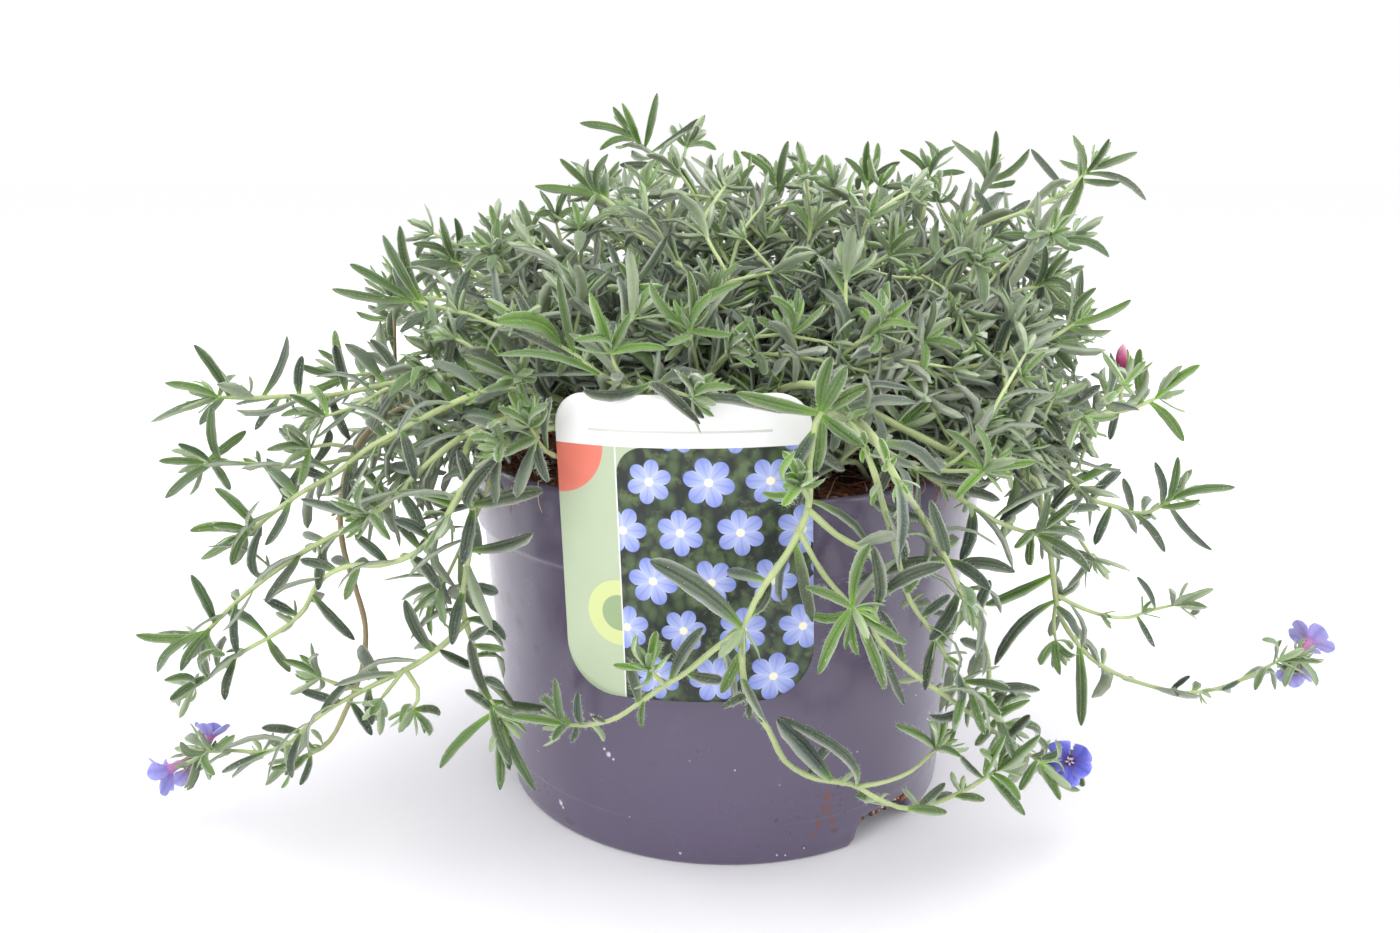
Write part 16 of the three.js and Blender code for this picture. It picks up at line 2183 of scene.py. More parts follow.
-37,-84,-40]},
{"n": "shoot_centre_right", "r": [75, 50], "o": 0, "k": 1, "f": 1, "p": [[135,-184,1196],[67,-228,1239],[-48,-276,1374],[-201,-357,1264]],
 "l": [143,-5,-274,1147,35,11,0,0,-32,-28,91,189,27,-192,1326,27,11,0,0,-52,-82,-22,236,102,-372,1258,28,11,0,0,-89,5,45,282,-81,-207,1262,31,4,0,0,8,-76,65,328,122,-236,1401,29,3,0,0,-89,-36,27,375,-35,-325,1285,30,10,
0,0,-9,40,91,421,5,-141,1345,33,6,0,0,-44,-62,65,467,62,-338,1394,30,6,0,0,-82,22,53,514,-142,-250,1316,27,12,0,0,-5,-25,97,560,-7,-230,1461,29,11,0,0,-83,-55,13,606,-98,-402,1404,27,5,0,0,-62,51,59,653,-175,-194,1375,
35,12,0,0,-50,-84,21,699,-117,-363,1448,29,12,0,0,-77,-5,-64,745,-76,-317,1222,32,8,9,0,-92,-38,3,792,-235,-297,1354,25,10,26,0,-5,-59,-81,838,-136,-443,1303,30,3,42,0,-77,21,-60,884,-209,-305,1221,26,12,59,0,-38,-92,3,
931,-234,-375,1287,25,6,75,0,5,4,-100,977,-219,-410,1195,23,11,92,0,-95,25,17]},
{"n": "shoot_top_fan", "r": [75, 50], "o": 0, "k": 1, "f": 1, "p": [[-60,-280,1199],[-42,-340,1239],[-11,-420,1330],[14,-530,1301]],
 "l": [149,-16,-330,1371,30,6,0,0,10,-98,-17,267,-147,-386,1316,33,8,0,0,68,-65,34,325,82,-303,1332,29,12,0,0,-9,-89,46,384,-37,-525,1257,28,8,0,0,29,3,96,443,-99,-316,1422,34,8,0,0,47,-76,45,501,86,-434,1353,36,4,0,0,
-59,-40,70,560,-100,-487,1353,29,5,0,0,70,-27,66,619,58,-374,1471,27,9,0,0,8,-98,17,677,35,-519,1239,34,8,0,0,11,-66,74,736,-62,-520,1401,26,11,6,0,51,-74,-44,795,95,-527,1320,32,8,27,0,-56,-76,-33,853,-39,-543,1254,26,
10,48,0,73,-66,16,971,53,-568,1258,26,5,90,0,-48,-79,39]},
{"n": "shoot_top_fan", "r": [75, 50], "o": 0, "k": 1, "f": 1, "p": [[-57,-283,1200],[-60,-359,1264],[-91,-449,1338],[-106,-583,1399]],
 "l": [144,-62,-310,1365,31,12,0,0,5,-100,4,193,4,-427,1257,28,4,0,0,-59,-19,78,242,-142,-380,1302,34,13,0,0,61,-68,41,291,15,-371,1364,34,7,0,0,-53,-82,18,340,-105,-492,1237,26,11,0,0,4,-22,98,389,-115,-343,1387,28,4,0,
0,-4,-97,24,487,-209,-445,1314,30,10,0,0,31,-63,71,536,-54,-435,1473,30,11,0,0,-52,-85,-6,584,-71,-553,1285,28,12,0,0,-38,-28,88,633,-182,-432,1399,27,9,0,0,17,-94,31,682,-3,-546,1447,35,9,0,0,-76,-65,7,731,-179,-598,
1295,33,13,4,0,23,-52,82,780,-121,-504,1467,29,8,21,0,1,-99,-11,829,-46,-632,1389,32,5,39,0,-82,-28,50,878,-190,-614,1413,28,6,56,0,71,-65,26,927,-76,-608,1464,25,4,74,0,-48,-79,-38,976,-108,-650,1384,21,7,91,0,-11,-13,
98]},
{"n": "shoot_right_fan", "r": [75, 50], "o": 0, "k": 1, "f": 1, "p": [[379,-201,1214],[410,-265,1241],[453,-371,1307],[508,-415,1344]],
 "l": [149,460,-251,1331,27,6,0,0,11,-95,-28,208,461,-341,1184,31,9,0,0,5,-37,93,267,352,-338,1352,33,6,0,0,78,-62,-12,325,512,-291,1290,34,12,0,0,-34,-92,20,384,393,-388,1247,31,4,0,0,67,-16,73,443,434,-316,1418,29,8,0,
0,31,-94,-12,501,522,-407,1278,27,8,0,0,-45,-43,78,560,377,-429,1350,35,7,0,0,87,-43,23,619,548,-345,1414,30,4,0,0,2,-100,10,677,496,-469,1271,30,6,0,0,34,-21,92,736,432,-423,1430,34,7,6,0,85,-53,6,795,605,-353,1342,32,
10,27,0,19,-86,46,853,508,-516,1338,26,4,48,0,83,21,51,912,537,-413,1405,27,3,69,0,60,-66,-45,971,599,-451,1335,22,6,90,0,-9,-35,93]},
{"n": "shoot_top_left_2", "r": [75, 50], "o": 0, "k": 1, "f": 1, "p": [[-184,-22,1154],[-141,-55,1238],[-51,-125,1397],[39,-122,1439]],
 "l": [144,-184,-141,1239,32,5,0,0,63,26,73,193,-166,58,1324,33,4,0,0,50,-68,54,242,-41,-109,1212,31,3,0,0,-6,-7,100,291,-197,-96,1319,34,8,0,0,91,-12,41,340,-27,-2,1348,33,12,0,0,-7,-86,51,389,-99,-201,1294,27,9,0,0,37,
29,88,438,-143,-48,1407,32,13,0,0,69,-66,31,487,2,-110,1351,34,5,0,0,-38,-36,85,536,-144,-193,1395,35,9,0,0,73,-3,68,584,-42,-41,1452,33,4,0,0,41,-77,48,633,34,-187,1401,33,4,0,0,-3,20,98,682,-100,-172,1523,27,11,0,0,93,
-9,36,731,80,-50,1469,27,7,4,0,34,-82,46,780,84,-217,1437,31,8,21,0,50,70,50,829,47,-100,1511,25,5,39,0,86,-14,-50,878,87,-84,1387,23,3,56,0,53,-22,82,927,95,-156,1484,28,8,74,0,55,76,-34,976,95,-79,1483,26,7,91,0,66,
-72,-22]},
{"n": "shoot_top_left_2", "r": [75, 50], "o": 0, "k": 1, "f": 1, "p": [[-187,-72,1233],[-115,-78,1295],[-25,-58,1437],[178,5,1412]],
 "l": [142,-61,-173,1283,30,5,0,0,45,63,64,186,-142,-52,1400,31,8,0,0,97,-25,0,230,-35,-38,1248,28,9,0,0,31,-30,90,274,-125,-187,1355,31,10,0,0,76,39,52,318,-89,21,1418,30,4,0,0,74,-61,30,362,51,-120,1330,35,6,0,0,-8,27,
96,406,-158,-119,1451,33,12,0,0,82,30,48,450,-28,34,1408,31,5,0,0,14,-55,82,494,-3,-183,1427,33,10,0,0,16,55,82,538,-123,-20,1515,28,6,0,0,89,-11,43,582,59,-23,1445,32,12,0,0,-22,-18,96,626,-9,-130,1531,34,11,0,0,74,65,
19,670,-10,109,1484,27,12,0,0,97,-14,22,714,114,-143,1353,34,7,0,0,74,56,37,758,88,-18,1576,31,10,14,0,85,24,-46,802,90,40,1370,25,9,29,0,92,-21,32,846,180,-95,1445,24,10,45,0,55,77,-32,890,183,56,1452,25,5,61,0,62,-41,
-67,934,213,2,1359,24,8,76,0,53,42,74,978,231,-4,1455,23,6,92,0,48,47,-74]},
{"n": "shoot_top_right_2", "r": [75, 50], "o": 0, "k": 1, "f": 1, "p": [[487,227,1382],[561,237,1427],[630,256,1505],[780,288,1506]],
 "l": [147,628,202,1394,27,11,0,0,18,49,85,203,551,219,1522,27,6,0,0,96,24,-13,258,632,322,1431,35,12,0,0,46,-57,68,312,646,164,1485,27,12,0,0,40,83,40,367,563,295,1558,35,3,0,0,97,-22,14,422,733,290,1485,28,6,0,0,-21,
-8,97,477,589,160,1598,35,9,0,0,66,64,39,532,605,403,1553,26,10,0,0,65,-36,67,588,710,210,1508,36,9,0,0,13,64,76,642,633,275,1652,28,3,0,0,98,17,-9,698,723,373,1410,35,11,0,0,82,-11,56,752,752,164,1559,33,8,12,0,77,62,
-13,807,773,370,1569,27,9,31,0,79,-42,-44,863,807,268,1446,26,4,51,0,52,44,73,917,824,268,1582,25,10,71,0,65,37,-67,973,817,332,1498,22,9,90,0,69,-71,16]},
{"n": "shoot_centre_right", "r": [75, 50], "o": 0, "k": 1, "f": 1, "p": [[137,-160,1109],[170,-162,1125],[210,-158,1151],[300,-151,1126]],
 "l": [160,239,-299,1153,26,12,0,0,74,56,38,240,171,-81,1266,28,8,0,0,96,-27,7,320,270,-149,1084,34,11,0,0,38,-6,92,400,190,-239,1251,27,5,0,0,83,50,23,480,214,-32,1202,29,4,0,0,69,-44,57,560,313,-246,1123,33,4,0,0,48,
48,73,640,259,-147,1276,29,11,0,0,92,5,-40,800,317,-222,1148,31,6,29,0,62,67,-41,880,350,-73,1174,23,12,57,0,67,-41,-62,960,361,-159,1069,23,11,86,0,63,33,70]},
{"n": "shoot_top_left_2", "r": [75, 50], "o": 0, "k": 1, "f": 1, "p": [[-184,-26,1164],[-123,-82,1201],[-52,-128,1257],[130,-235,1216]],
 "l": [143,-38,-49,1191,27,6,0,0,-4,-90,44,189,-143,-183,1204,35,11,0,0,91,12,41,236,-74,-54,1340,32,6,0,0,54,-82,-18,282,-31,-128,1163,28,9,0,0,9,-36,93,328,-128,-190,1320,34,9,0,0,100,-9,-4,375,-17,0,1276,28,11,0,0,36,
-79,49,421,-52,-244,1205,27,12,0,0,44,9,89,467,-117,-95,1352,29,9,0,0,86,-50,12,514,43,-83,1240,33,4,0,0,7,-56,83,560,-112,-243,1294,35,9,0,0,89,-3,46,606,22,-69,1375,35,7,0,0,58,-81,-13,653,11,-182,1136,27,9,0,0,72,-37,
58,699,-28,-224,1364,34,5,0,0,89,-31,-34,745,94,-97,1240,28,5,9,0,41,-91,-10,792,45,-254,1208,27,12,26,0,94,30,17,838,123,-210,1299,29,4,42,0,39,-41,-82,884,147,-206,1161,29,12,59,0,38,-75,55,931,114,-286,1241,23,11,75,
0,86,17,-49,977,194,-236,1226,20,4,92,0,-4,-81,-59]},
{"n": "shoot_left_top", "r": [75, 50], "o": 0, "k": 1, "f": 1, "p": [[-248,-223,1242],[-290,-190,1255],[-343,-113,1303],[-447,31,1216]],
 "l": [147,-281,-108,1198,29,12,0,0,-90,7,43,203,-320,-184,1389,26,9,0,0,-74,59,-34,258,-393,-178,1216,34,12,0,0,-7,71,70,312,-215,-58,1319,32,7,0,0,-90,38,21,367,-396,-247,1378,30,9,0,0,-25,93,28,422,-354,-35,1236,30,9,
0,0,-29,12,95,477,-281,-140,1392,32,12,0,0,-75,66,6,532,-438,-120,1331,31,6,0,0,36,78,51,588,-301,27,1312,31,6,0,0,-92,12,37,642,-425,-82,1427,28,10,0,0,-32,82,-48,698,-402,-107,1165,30,4,0,0,-46,88,14,752,-331,74,1338,
26,11,12,0,-71,35,-62,807,-508,-61,1279,32,11,31,0,-5,83,-55,863,-384,27,1173,28,10,51,0,-89,44,12,917,-458,57,1268,23,10,71,0,-26,25,-93,973,-499,32,1169,27,4,90,0,12,99,9]},
{"n": "shoot_back_3", "r": [75, 50], "o": 0, "k": 1, "f": 1, "p": [[-109,561,1205],[-83,608,1300],[-41,648,1423],[56,674,1570]],
 "l": [142,-7,538,1343,30,7,0,0,-20,81,55,186,-179,632,1340,26,11,0,0,75,30,59,230,1,660,1273,35,7,0,0,-17,17,97,274,-96,538,1402,28,9,0,0,36,82,44,318,-101,742,1375,28,5,0,0,52,-39,76,362,19,599,1388,34,9,0,0,-43,62,65,
406,-167,611,1430,30,8,0,0,67,42,61,450,11,751,1361,35,7,0,0,-4,-14,99,494,-30,548,1472,34,10,0,0,14,83,54,538,-116,754,1485,31,3,0,0,72,-27,64,582,92,646,1475,31,6,0,0,-48,36,80,626,-111,617,1528,32,9,0,0,77,42,49,670,
54,772,1491,32,9,0,0,6,-51,86,714,16,564,1510,32,8,0,0,34,67,66,758,-52,737,1562,28,4,14,0,84,-25,48,802,127,665,1501,33,12,29,0,-15,16,98,846,1,623,1615,32,12,45,0,84,50,23,890,64,729,1576,30,4,61,0,35,-74,57,934,117,
618,1599,26,10,76,0,1,76,65,978,47,687,1624,24,11,92,0,100,-7,5]},
{"n": "shoot_back_8", "r": [75, 50], "o": 0, "k": 1, "f": 1, "p": [[-530,205,1200],[-571,178,1196],[-626,142,1219],[-670,44,1115]],
 "l": [154,-560,110,1114,33,8,0,0,-94,-17,30,222,-658,223,1221,36,3,0,0,-38,-89,-27,289,-553,47,1286,35,6,0,0,-95,-22,-20,357,-686,146,1153,29,8,0,0,-23,-42,88,425,-626,195,1338,28,6,0,0,-77,-63,-12,492,-631,26,1235,32,
13,0,0,-77,28,57,560,-735,192,1230,34,8,0,0,-21,-89,40,628,-636,51,1343,27,11,0,0,-73,-49,-49,695,-601,115,1077,28,7,0,0,-66,-75,-3,763,-770,52,1187,34,12,15,0,32,-49,-81,831,-594,-14,1130,25,12,40,0,-74,-9,-67,898,-707,
82,1057,30,12,64,0,14,-98,-14,966,-707,-36,1103,21,10,88,0,15,19,-97]},
{"n": "shoot_centre_right", "r": [75, 50], "o": 0, "k": 1, "f": 1, "p": [[139,-149,1056],[75,-196,1111],[-11,-266,1184],[-175,-354,1180]],
 "l": [143,92,-306,1138,31,5,0,0,-84,31,44,189,-22,-172,1120,32,4,0,0,15,-79,60,236,102,-213,1232,35,9,0,0,-89,-45,-6,328,-13,-169,1201,33,7,0,0,-21,-97,8,375,109,-326,1230,26,6,0,0,-96,-8,28,421,-60,-256,1132,31,5,0,0,
14,-37,92,467,34,-191,1308,30,6,0,0,-65,-76,10,560,-85,-209,1201,33,7,0,0,-12,-89,44,606,38,-310,1284,29,6,0,0,-93,-37,5,653,-82,-321,1123,33,7,0,0,-48,-24,85,699,-90,-225,1277,33,7,0,0,-70,-70,-13,745,-79,-412,1206,30,
9,9,0,-97,25,-8,792,-187,-247,1113,31,11,26,0,-52,-80,29,838,-146,-347,1266,28,8,42,0,-71,-31,-64,931,-253,-327,1199,22,11,75,0,-13,-92,-36,977,-210,-427,1218,21,10,92,0,-81,23,-53]},
{"n": "shoot_top_centre", "r": [75, 50], "o": 0, "k": 1, "f": 1, "p": [[20,-61,1144],[1,-109,1153],[-22,-185,1162],[-95,-261,1105]],
 "l": [222,-91,-108,1247,29,4,0,0,-2,-98,-20,289,123,-207,1185,36,4,0,0,-67,-74,7,357,-114,-170,1092,32,7,0,0,17,-86,47,425,-11,-196,1316,35,5,0,0,-20,-90,-39,560,-149,-196,1206,32,9,0,0,24,-97,-5,628,46,-262,1238,30,6,
0,0,-62,-72,-31,763,-159,-257,1212,33,11,15,0,-18,-55,-81,898,-154,-222,1070,23,10,64,0,-6,-98,-20,966,-140,-324,1112,22,11,88,0,-23,15,-96]},
{"n": "shoot_top_front", "r": [75, 50], "o": 0, "k": 1, "f": 1, "p": [[222,-204,1123],[209,-222,1149],[184,-235,1222],[98,-250,1306]],
 "l": [154,166,-367,1102,28,13,0,0,-26,-11,96,222,123,-167,1276,30,6,0,0,-4,-95,31,289,263,-314,1245,31,3,0,0,-84,10,53,357,86,-244,1207,28,4,0,0,43,-19,88,425,288,-135,1287,26,4,0,0,-49,-50,71,492,174,-355,1222,35,4,0,
0,-15,34,93,560,143,-172,1277,34,11,0,0,4,-79,61,628,246,-310,1336,35,7,0,0,-85,18,50,695,54,-254,1244,29,10,0,0,13,-5,99,763,152,-199,1339,29,6,15,0,-84,-53,13,831,100,-325,1308,31,5,40,0,-60,61,51,898,32,-195,1315,28,
4,64,0,-14,-73,67,966,88,-266,1395,22,7,88,0,-98,3,-18]},
{"n": "shoot_top_mid", "r": [75, 50], "o": 0, "k": 1, "f": 1, "p": [[131,102,1381],[129,28,1433],[145,-78,1522],[83,-236,1502]],
 "l": [144,174,80,1503,29,6,0,0,-25,-95,19,193,152,-102,1384,35,7,0,0,-21,-17,96,291,220,7,1481,33,4,0,0,-51,-77,38,340,80,-116,1458,32,3,0,0,55,-5,83,389,125,17,1566,35,6,0,0,28,-96,5,438,254,-81,1469,26,7,0,0,-33,-42,
85,487,29,-85,1534,36,6,0,0,62,-51,60,536,210,-42,1604,27,11,0,0,-31,-95,9,584,145,-206,1489,35,10,0,0,10,-11,99,682,220,-180,1537,36,7,0,0,-78,-59,19,731,13,-187,1488,26,8,4,0,46,-84,29,829,140,-229,1424,29,13,39,0,-64,
-66,40,878,-1,-233,1539,27,8,56,0,31,-81,-49,927,102,-276,1519,26,4,74,0,-82,-12,-56,976,32,-291,1453,27,11,91,0,23,-70,67]},
{"n": "shoot_centre_right", "r": [75, 50], "o": 0, "k": 1, "f": 1, "p": [[135,-181,1185],[145,-168,1225],[164,-162,1276],[184,-99,1320]],
 "l": [160,65,-175,1287,30,9,0,0,68,40,61,240,234,-68,1269,31,10,0,0,-26,-27,93,320,134,-271,1341,26,7,0,0,40,68,62,400,204,-47,1332,31,6,0,0,15,-66,73,480,224,-284,1295,27,6,0,0,11,44,89,560,95,-163,1382,29,9,0,0,89,9,
45,640,189,-8,1268,35,6,0,0,30,-3,95,720,258,-139,1368,29,5,0,0,-36,91,20,800,121,-59,1387,28,9,29,0,84,55,-2,880,235,-26,1296,28,4,57,0,-30,26,92,960,209,-78,1407,21,11,86,0,4,95,-31]},
{"n": "shoot_left_low_3", "r": [75, 50], "o": 0, "k": 1, "f": 1, "p": [[-175,-494,1037],[-168,-526,1077],[-147,-565,1144],[-102,-619,1176]],
 "l": [157,-85,-481,1138,27,7,0,0,-23,-83,51,230,-171,-653,1082,30,3,0,0,20,14,97,303,-228,-495,1184,35,3,0,0,48,-76,44,450,-233,-649,1156,33,9,0,0,61,2,79,523,-146,-476,1213,32,4,0,0,21,-80,56,743,-18,-578,1233,32,8,8,
0,-9,-99,11,890,-94,-637,1259,24,10,61,0,65,-64,-42]},
{"n": "shoot_right_fan", "r": [75, 50], "o": 0, "k": 1, "f": 1, "p": [[337,-131,1053],[423,-137,1090],[570,-143,1161],[737,-120,1082]],
 "l": [143,444,-222,1069,34,6,0,0,67,56,49,189,393,-97,1202,31,7,0,0,98,-21,-3,236,513,-110,1050,30,6,0,0,28,-36,89,282,458,-227,1168,34,5,0,0,87,49,-1,328,460,-11,1165,34,12,0,0,87,-42,25,421,479,-159,1237,34,7,0,0,98,
5,-17,467,580,-66,1133,29,4,0,0,39,-62,68,514,559,-231,1178,32,5,0,0,67,64,37,560,551,-88,1249,29,6,0,0,92,-38,-8,653,646,-237,1282,27,10,0,0,88,34,-34,699,675,-11,1157,34,8,0,0,81,-55,-18,745,645,-224,1081,26,5,9,0,88,
46,-9,792,732,-111,1188,30,9,26,0,41,-2,-91,838,690,-88,1053,26,12,42,0,91,-37,20,884,766,-185,1100,29,3,59,0,36,72,-59,931,760,-80,1096,29,7,75,0,38,-57,-73]},
{"n": "shoot_back_8", "r": [75, 50], "o": 0, "k": 1, "f": 1, "p": [[-656,255,1300],[-678,304,1316],[-693,386,1356],[-696,469,1338]],
 "l": [154,-788,352,1260,31,12,0,0,18,70,69,222,-570,386,1369,28,12,0,0,-74,65,14,289,-779,306,1407,32,10,0,0,9,100,-1,357,-672,451,1232,35,9,0,0,-30,51,81,425,-641,341,1447,31,9,0,0,-41,91,2,492,-814,395,1346,31,7,0,0,
36,76,53,560,-620,445,1359,29,9,0,0,-72,51,47,628,-748,434,1493,30,11,0,0,12,93,-34,695,-738,474,1255,30,6,0,0,13,80,58,763,-604,529,1412,28,12,15,0,-54,66,-52,831,-789,514,1360,27,10,40,0,59,68,-42,898,-651,503,1274,25,
6,64,0,-52,79,34,966,-693,525,1369,21,9,88,0,-8,41,-91]},
{"n": "shoot_top_fan", "r": [75, 50], "o": 0, "k": 1, "f": 1, "p": [[-38,-380,1378],[-14,-361,1472],[27,-315,1622],[92,-238,1703]],
 "l": [143,119,-330,1497,33,7,0,0,-48,1,88,189,-72,-456,1540,27,7,0,0,49,59,64,236,-28,-230,1523,29,11,0,0,35,-47,81,282,66,-393,1538,27,4,0,0,-44,62,65,328,-95,-360,1573,36,12,0,0,75,30,59,375,85,-229,1536,27,11,0,0,
-13,-26,96,514,117,-323,1593,30,8,0,0,-34,22,91,838,48,-189,1697,23,8,42,0,87,-5,49,931,89,-222,1754,23,7,75,0,77,52,-38]},
{"n": "shoot_left_top", "r": [75, 50], "o": 0, "k": 1, "f": 1, "p": [[-227,-116,1095],[-240,-103,1147],[-254,-75,1239],[-287,-13,1275]],
 "l": [157,-183,-149,1271,34,4,0,0,-72,58,38,230,-374,-89,1195,28,7,0,0,45,21,86,303,-183,-34,1239,35,11,0,0,-78,-21,59,377,-301,-214,1256,32,7,0,0,5,64,77,450,-287,40,1255,29,6,0,0,10,-47,88,523,-165,-129,1294,33,5,0,0,
-54,49,68,597,-363,-76,1308,27,6,0,0,56,43,71,670,-208,62,1289,30,6,0,0,-68,-4,74,743,-284,-90,1370,34,5,8,0,-34,93,14,817,-358,28,1211,28,5,35,0,4,56,83,890,-265,31,1311,30,10,61,0,-92,31,-23,963,-349,22,1323,24,4,87,0,
38,89,-23]},
{"n": "shoot_back_12", "r": [75, 50], "o": 0, "k": 1, "f": 1, "p": [[470,-38,1214],[479,-101,1227],[473,-160,1246],[443,-352,1174]],
 "l": [147,399,-163,1140,30,6,0,0,45,-75,49,203,474,-109,1355,31,3,0,0,16,-96,-23,258,589,-201,1175,26,10,0,0,-46,-69,56,312,372,-163,1259,27,11,0,0,55,-83,13,367,570,-136,1354,33,4,0,0,-38,-92,6,422,455,-279,1192,33,4,
0,0,7,-26,96,477,426,-97,1335,36,5,0,0,15,-94,30,532,583,-250,1295,31,3,0,0,-77,-51,38,588,363,-193,1209,28,5,0,0,34,-89,29,642,493,-242,1361,28,5,0,0,-24,-78,-58,698,522,-231,1122,35,4,0,0,-41,-88,25,752,370,-272,1253,
32,9,12,0,43,-72,-55,807,526,-363,1227,24,8,31,0,-72,-37,-59,863,422,-323,1141,27,3,51,0,35,-80,49,917,417,-405,1230,22,6,71,0,12,-36,-92,973,485,-406,1134,23,6,90,0,-85,-53,7]},
{"n": "shoot_right_upper", "r": [75, 50], "o": 0, "k": 1, "f": 1, "p": [[335,-36,1211],[383,-56,1234],[440,-69,1265],[541,-130,1242]],
 "l": [154,478,22,1260,35,10,0,0,39,-87,30,222,431,-168,1223,28,12,0,0,71,38,60,289,391,-41,1343,32,3,0,0,90,-42,-7,357,545,-32,1222,28,12,0,0,15,-48,86,425,434,-188,1350,36,7,0,0,83,48,29,492,446,35,1349,31,12,0,0,78,
-58,25,560,539,-152,1172,27,9,0,0,61,7,79,628,472,-109,1358,34,6,0,0,89,-11,-43,695,577,25,1211,29,11,0,0,63,-77,11,763,500,-237,1230,33,12,15,0,97,23,-4,831,572,-101,1321,27,10,40,0,46,-59,-66,898,572,-132,1169,29,4,64,
0,57,-57,59,966,573,-203,1272,21,13,88,0,74,17,-65]},
{"n": "shoot_top_mid", "r": [75, 50], "o": 0, "k": 1, "f": 1, "p": [[77,175,1209],[102,136,1246],[115,65,1329],[177,8,1314]],
 "l": [154,13,60,1300,35,11,0,0,85,-36,38,222,187,195,1328,30,12,0,0,9,-94,33,289,126,-16,1246,34,12,0,0,25,8,97,357,53,157,1371,33,11,0,0,40,-85,34,425,194,57,1311,35,7,0,0,-59,-34,73,492,1,33,1324,31,11,0,0,52,-39,76,
560,149,106,1432,27,11,0,0,-14,-97,19,628,172,-34,1327,27,6,0,0,-20,-8,98,695,79,-58,1436,28,10,0,0,88,-44,-16,763,282,71,1360,25,6,15,0,20,-95,-25,831,159,-34,1266,28,10,40,0,94,-7,33,898,221,-30,1377,23,5,64,0,46,-30,
-83,966,235,-3,1281,24,5,88,0,-7,-94,34]},
{"n": "shoot_top_right", "r": [75, 50], "o": 0, "k": 1, "f": 1, "p": [[429,215,1591],[435,295,1591],[447,386,1582],[431,549,1467]],
 "l": [144,364,317,1676,29,5,0,0,38,84,-38,193,448,380,1475,32,10,0,0,-1,70,71,242,517,369,1705,27,8,0,0,-27,82,-50,291,342,379,1590,34,9,0,0,72,69,-3,340,524,352,1549,34,13,0,0,-42,87,25,389,426,374,1704,31,7,0,0,27,84,
-47,438,411,443,1528,35,8,0,0,54,48,69,487,575,407,1657,32,9,0,0,-39,89,-24,536,329,433,1665,28,7,0,0,48,84,-27,584,507,380,1466,33,4,0,0,-8,99,13,633,477,470,1647,28,6,0,0,-15,56,-82,682,319,461,1487,31,11,0,0,56,81,
-16,731,532,490,1511,36,5,4,0,-74,59,-32,780,383,528,1592,27,8,21,0,19,50,-84,829,426,461,1430,27,5,39,0,0,100,0,878,475,562,1516,28,4,56,0,-51,26,-82,927,356,564,1468,23,7,74,0,58,60,-56,976,467,582,1408,28,6,91,0,-72,
69,9]},
{"n": "shoot_top_left_2", "r": [75, 50], "o": 0, "k": 1, "f": 1, "p": [[-187,-79,1242],[-250,-68,1243],[-378,-47,1250],[-499,68,1142]],
 "l": [144,-281,15,1236,33,10,0,0,-79,-61,9,193,-298,-110,1338,28,3,0,0,-77,40,-49,242,-293,-85,1136,34,5,0,0,-84,24,48,291,-317,42,1340,27,8,0,0,-88,-29,-37,340,-360,-158,1278,27,5,0,0,-66,75,-11,389,-355,9,1199,34,7,0,
0,-69,-45,56,438,-315,-63,1416,34,12,0,0,-98,4,-17,487,-417,-161,1178,27,11,0,0,-73,47,50,536,-385,44,1285,28,6,0,0,-88,-48,-7,584,-436,-96,1310,29,11,0,0,-56,64,-52,682,-426,52,1331,26,10,0,0,-74,23,-63,731,-492,-81,
1200,35,4,4,0,-34,87,-37,780,-388,67,1163,29,7,21,0,-95,16,-27,829,-515,50,1236,25,12,39,0,-13,38,-92,878,-512,34,1072,25,5,56,0,-33,91,26,927,-486,142,1155,25,9,74,0,-68,-19,-71,976,-587,71,1135,27,12,91,0,19,74,-65]},
{"n": "shoot_centre_right", "r": [75, 50], "o": 0, "k": 1, "f": 1, "p": [[145,-232,1355],[201,-214,1366],[307,-193,1380],[394,-121,1306]],
 "l": [149,225,-127,1470,30,13,0,0,92,-11,-38,208,301,-182,1258,30,7,0,0,59,21,78,267,250,-266,1459,28,5,0,0,80,54,-25,325,243,-113,1380,30,7,0,0,91,-41,10,384,320,-272,1351,27,7,0,0,50,71,50,443,292,-182,1510,35,11,0,0,
92,0,-40,501,361,-112,1293,33,7,0,0,72,-25,64,560,357,-273,1429,35,6,0,0,68,72,-17,619,365,-60,1445,27,11,0,0,87,-27,-42,677,348,-234,1246,32,9,0,0,81,59,5,736,427,-150,1431,31,3,6,0,36,45,-82,795,311,-66,1287,33,3,27,0,
95,8,-29,853,443,-162,1289,28,5,48,0,-11,95,-30,912,423,-55,1321,26,12,69,0,27,-24,-93,971,402,-100,1241,21,7,90,0,82,46,35]},
{"n": "shoot_left_top", "r": [75, 50], "o": 0, "k": 1, "f": 1, "p": [[-326,-251,1289],[-309,-325,1286],[-252,-431,1310],[-93,-577,1219]],
 "l": [142,-286,-357,1202,35,6,0,0,-10,-76,64,186,-382,-370,1344,28,8,0,0,55,-73,-40,230,-157,-352,1324,31,12,0,0,-27,-95,-18,274,-356,-401,1218,27,7,0,0,64,-62,45,318,-305,-356,1409,29,4,0,0,37,-89,-27,362,-158,-378,
1213,34,4,0,0,-3,-89,46,406,-357,-467,1344,35,10,0,0,92,-38,12,450,-212,-364,1399,29,9,0,0,0,-100,-5,494,-251,-497,1197,29,3,0,0,32,-55,77,538,-329,-436,1419,31,7,0,0,65,-76,-7,582,-123,-382,1313,27,9,0,0,12,-98,17,626,
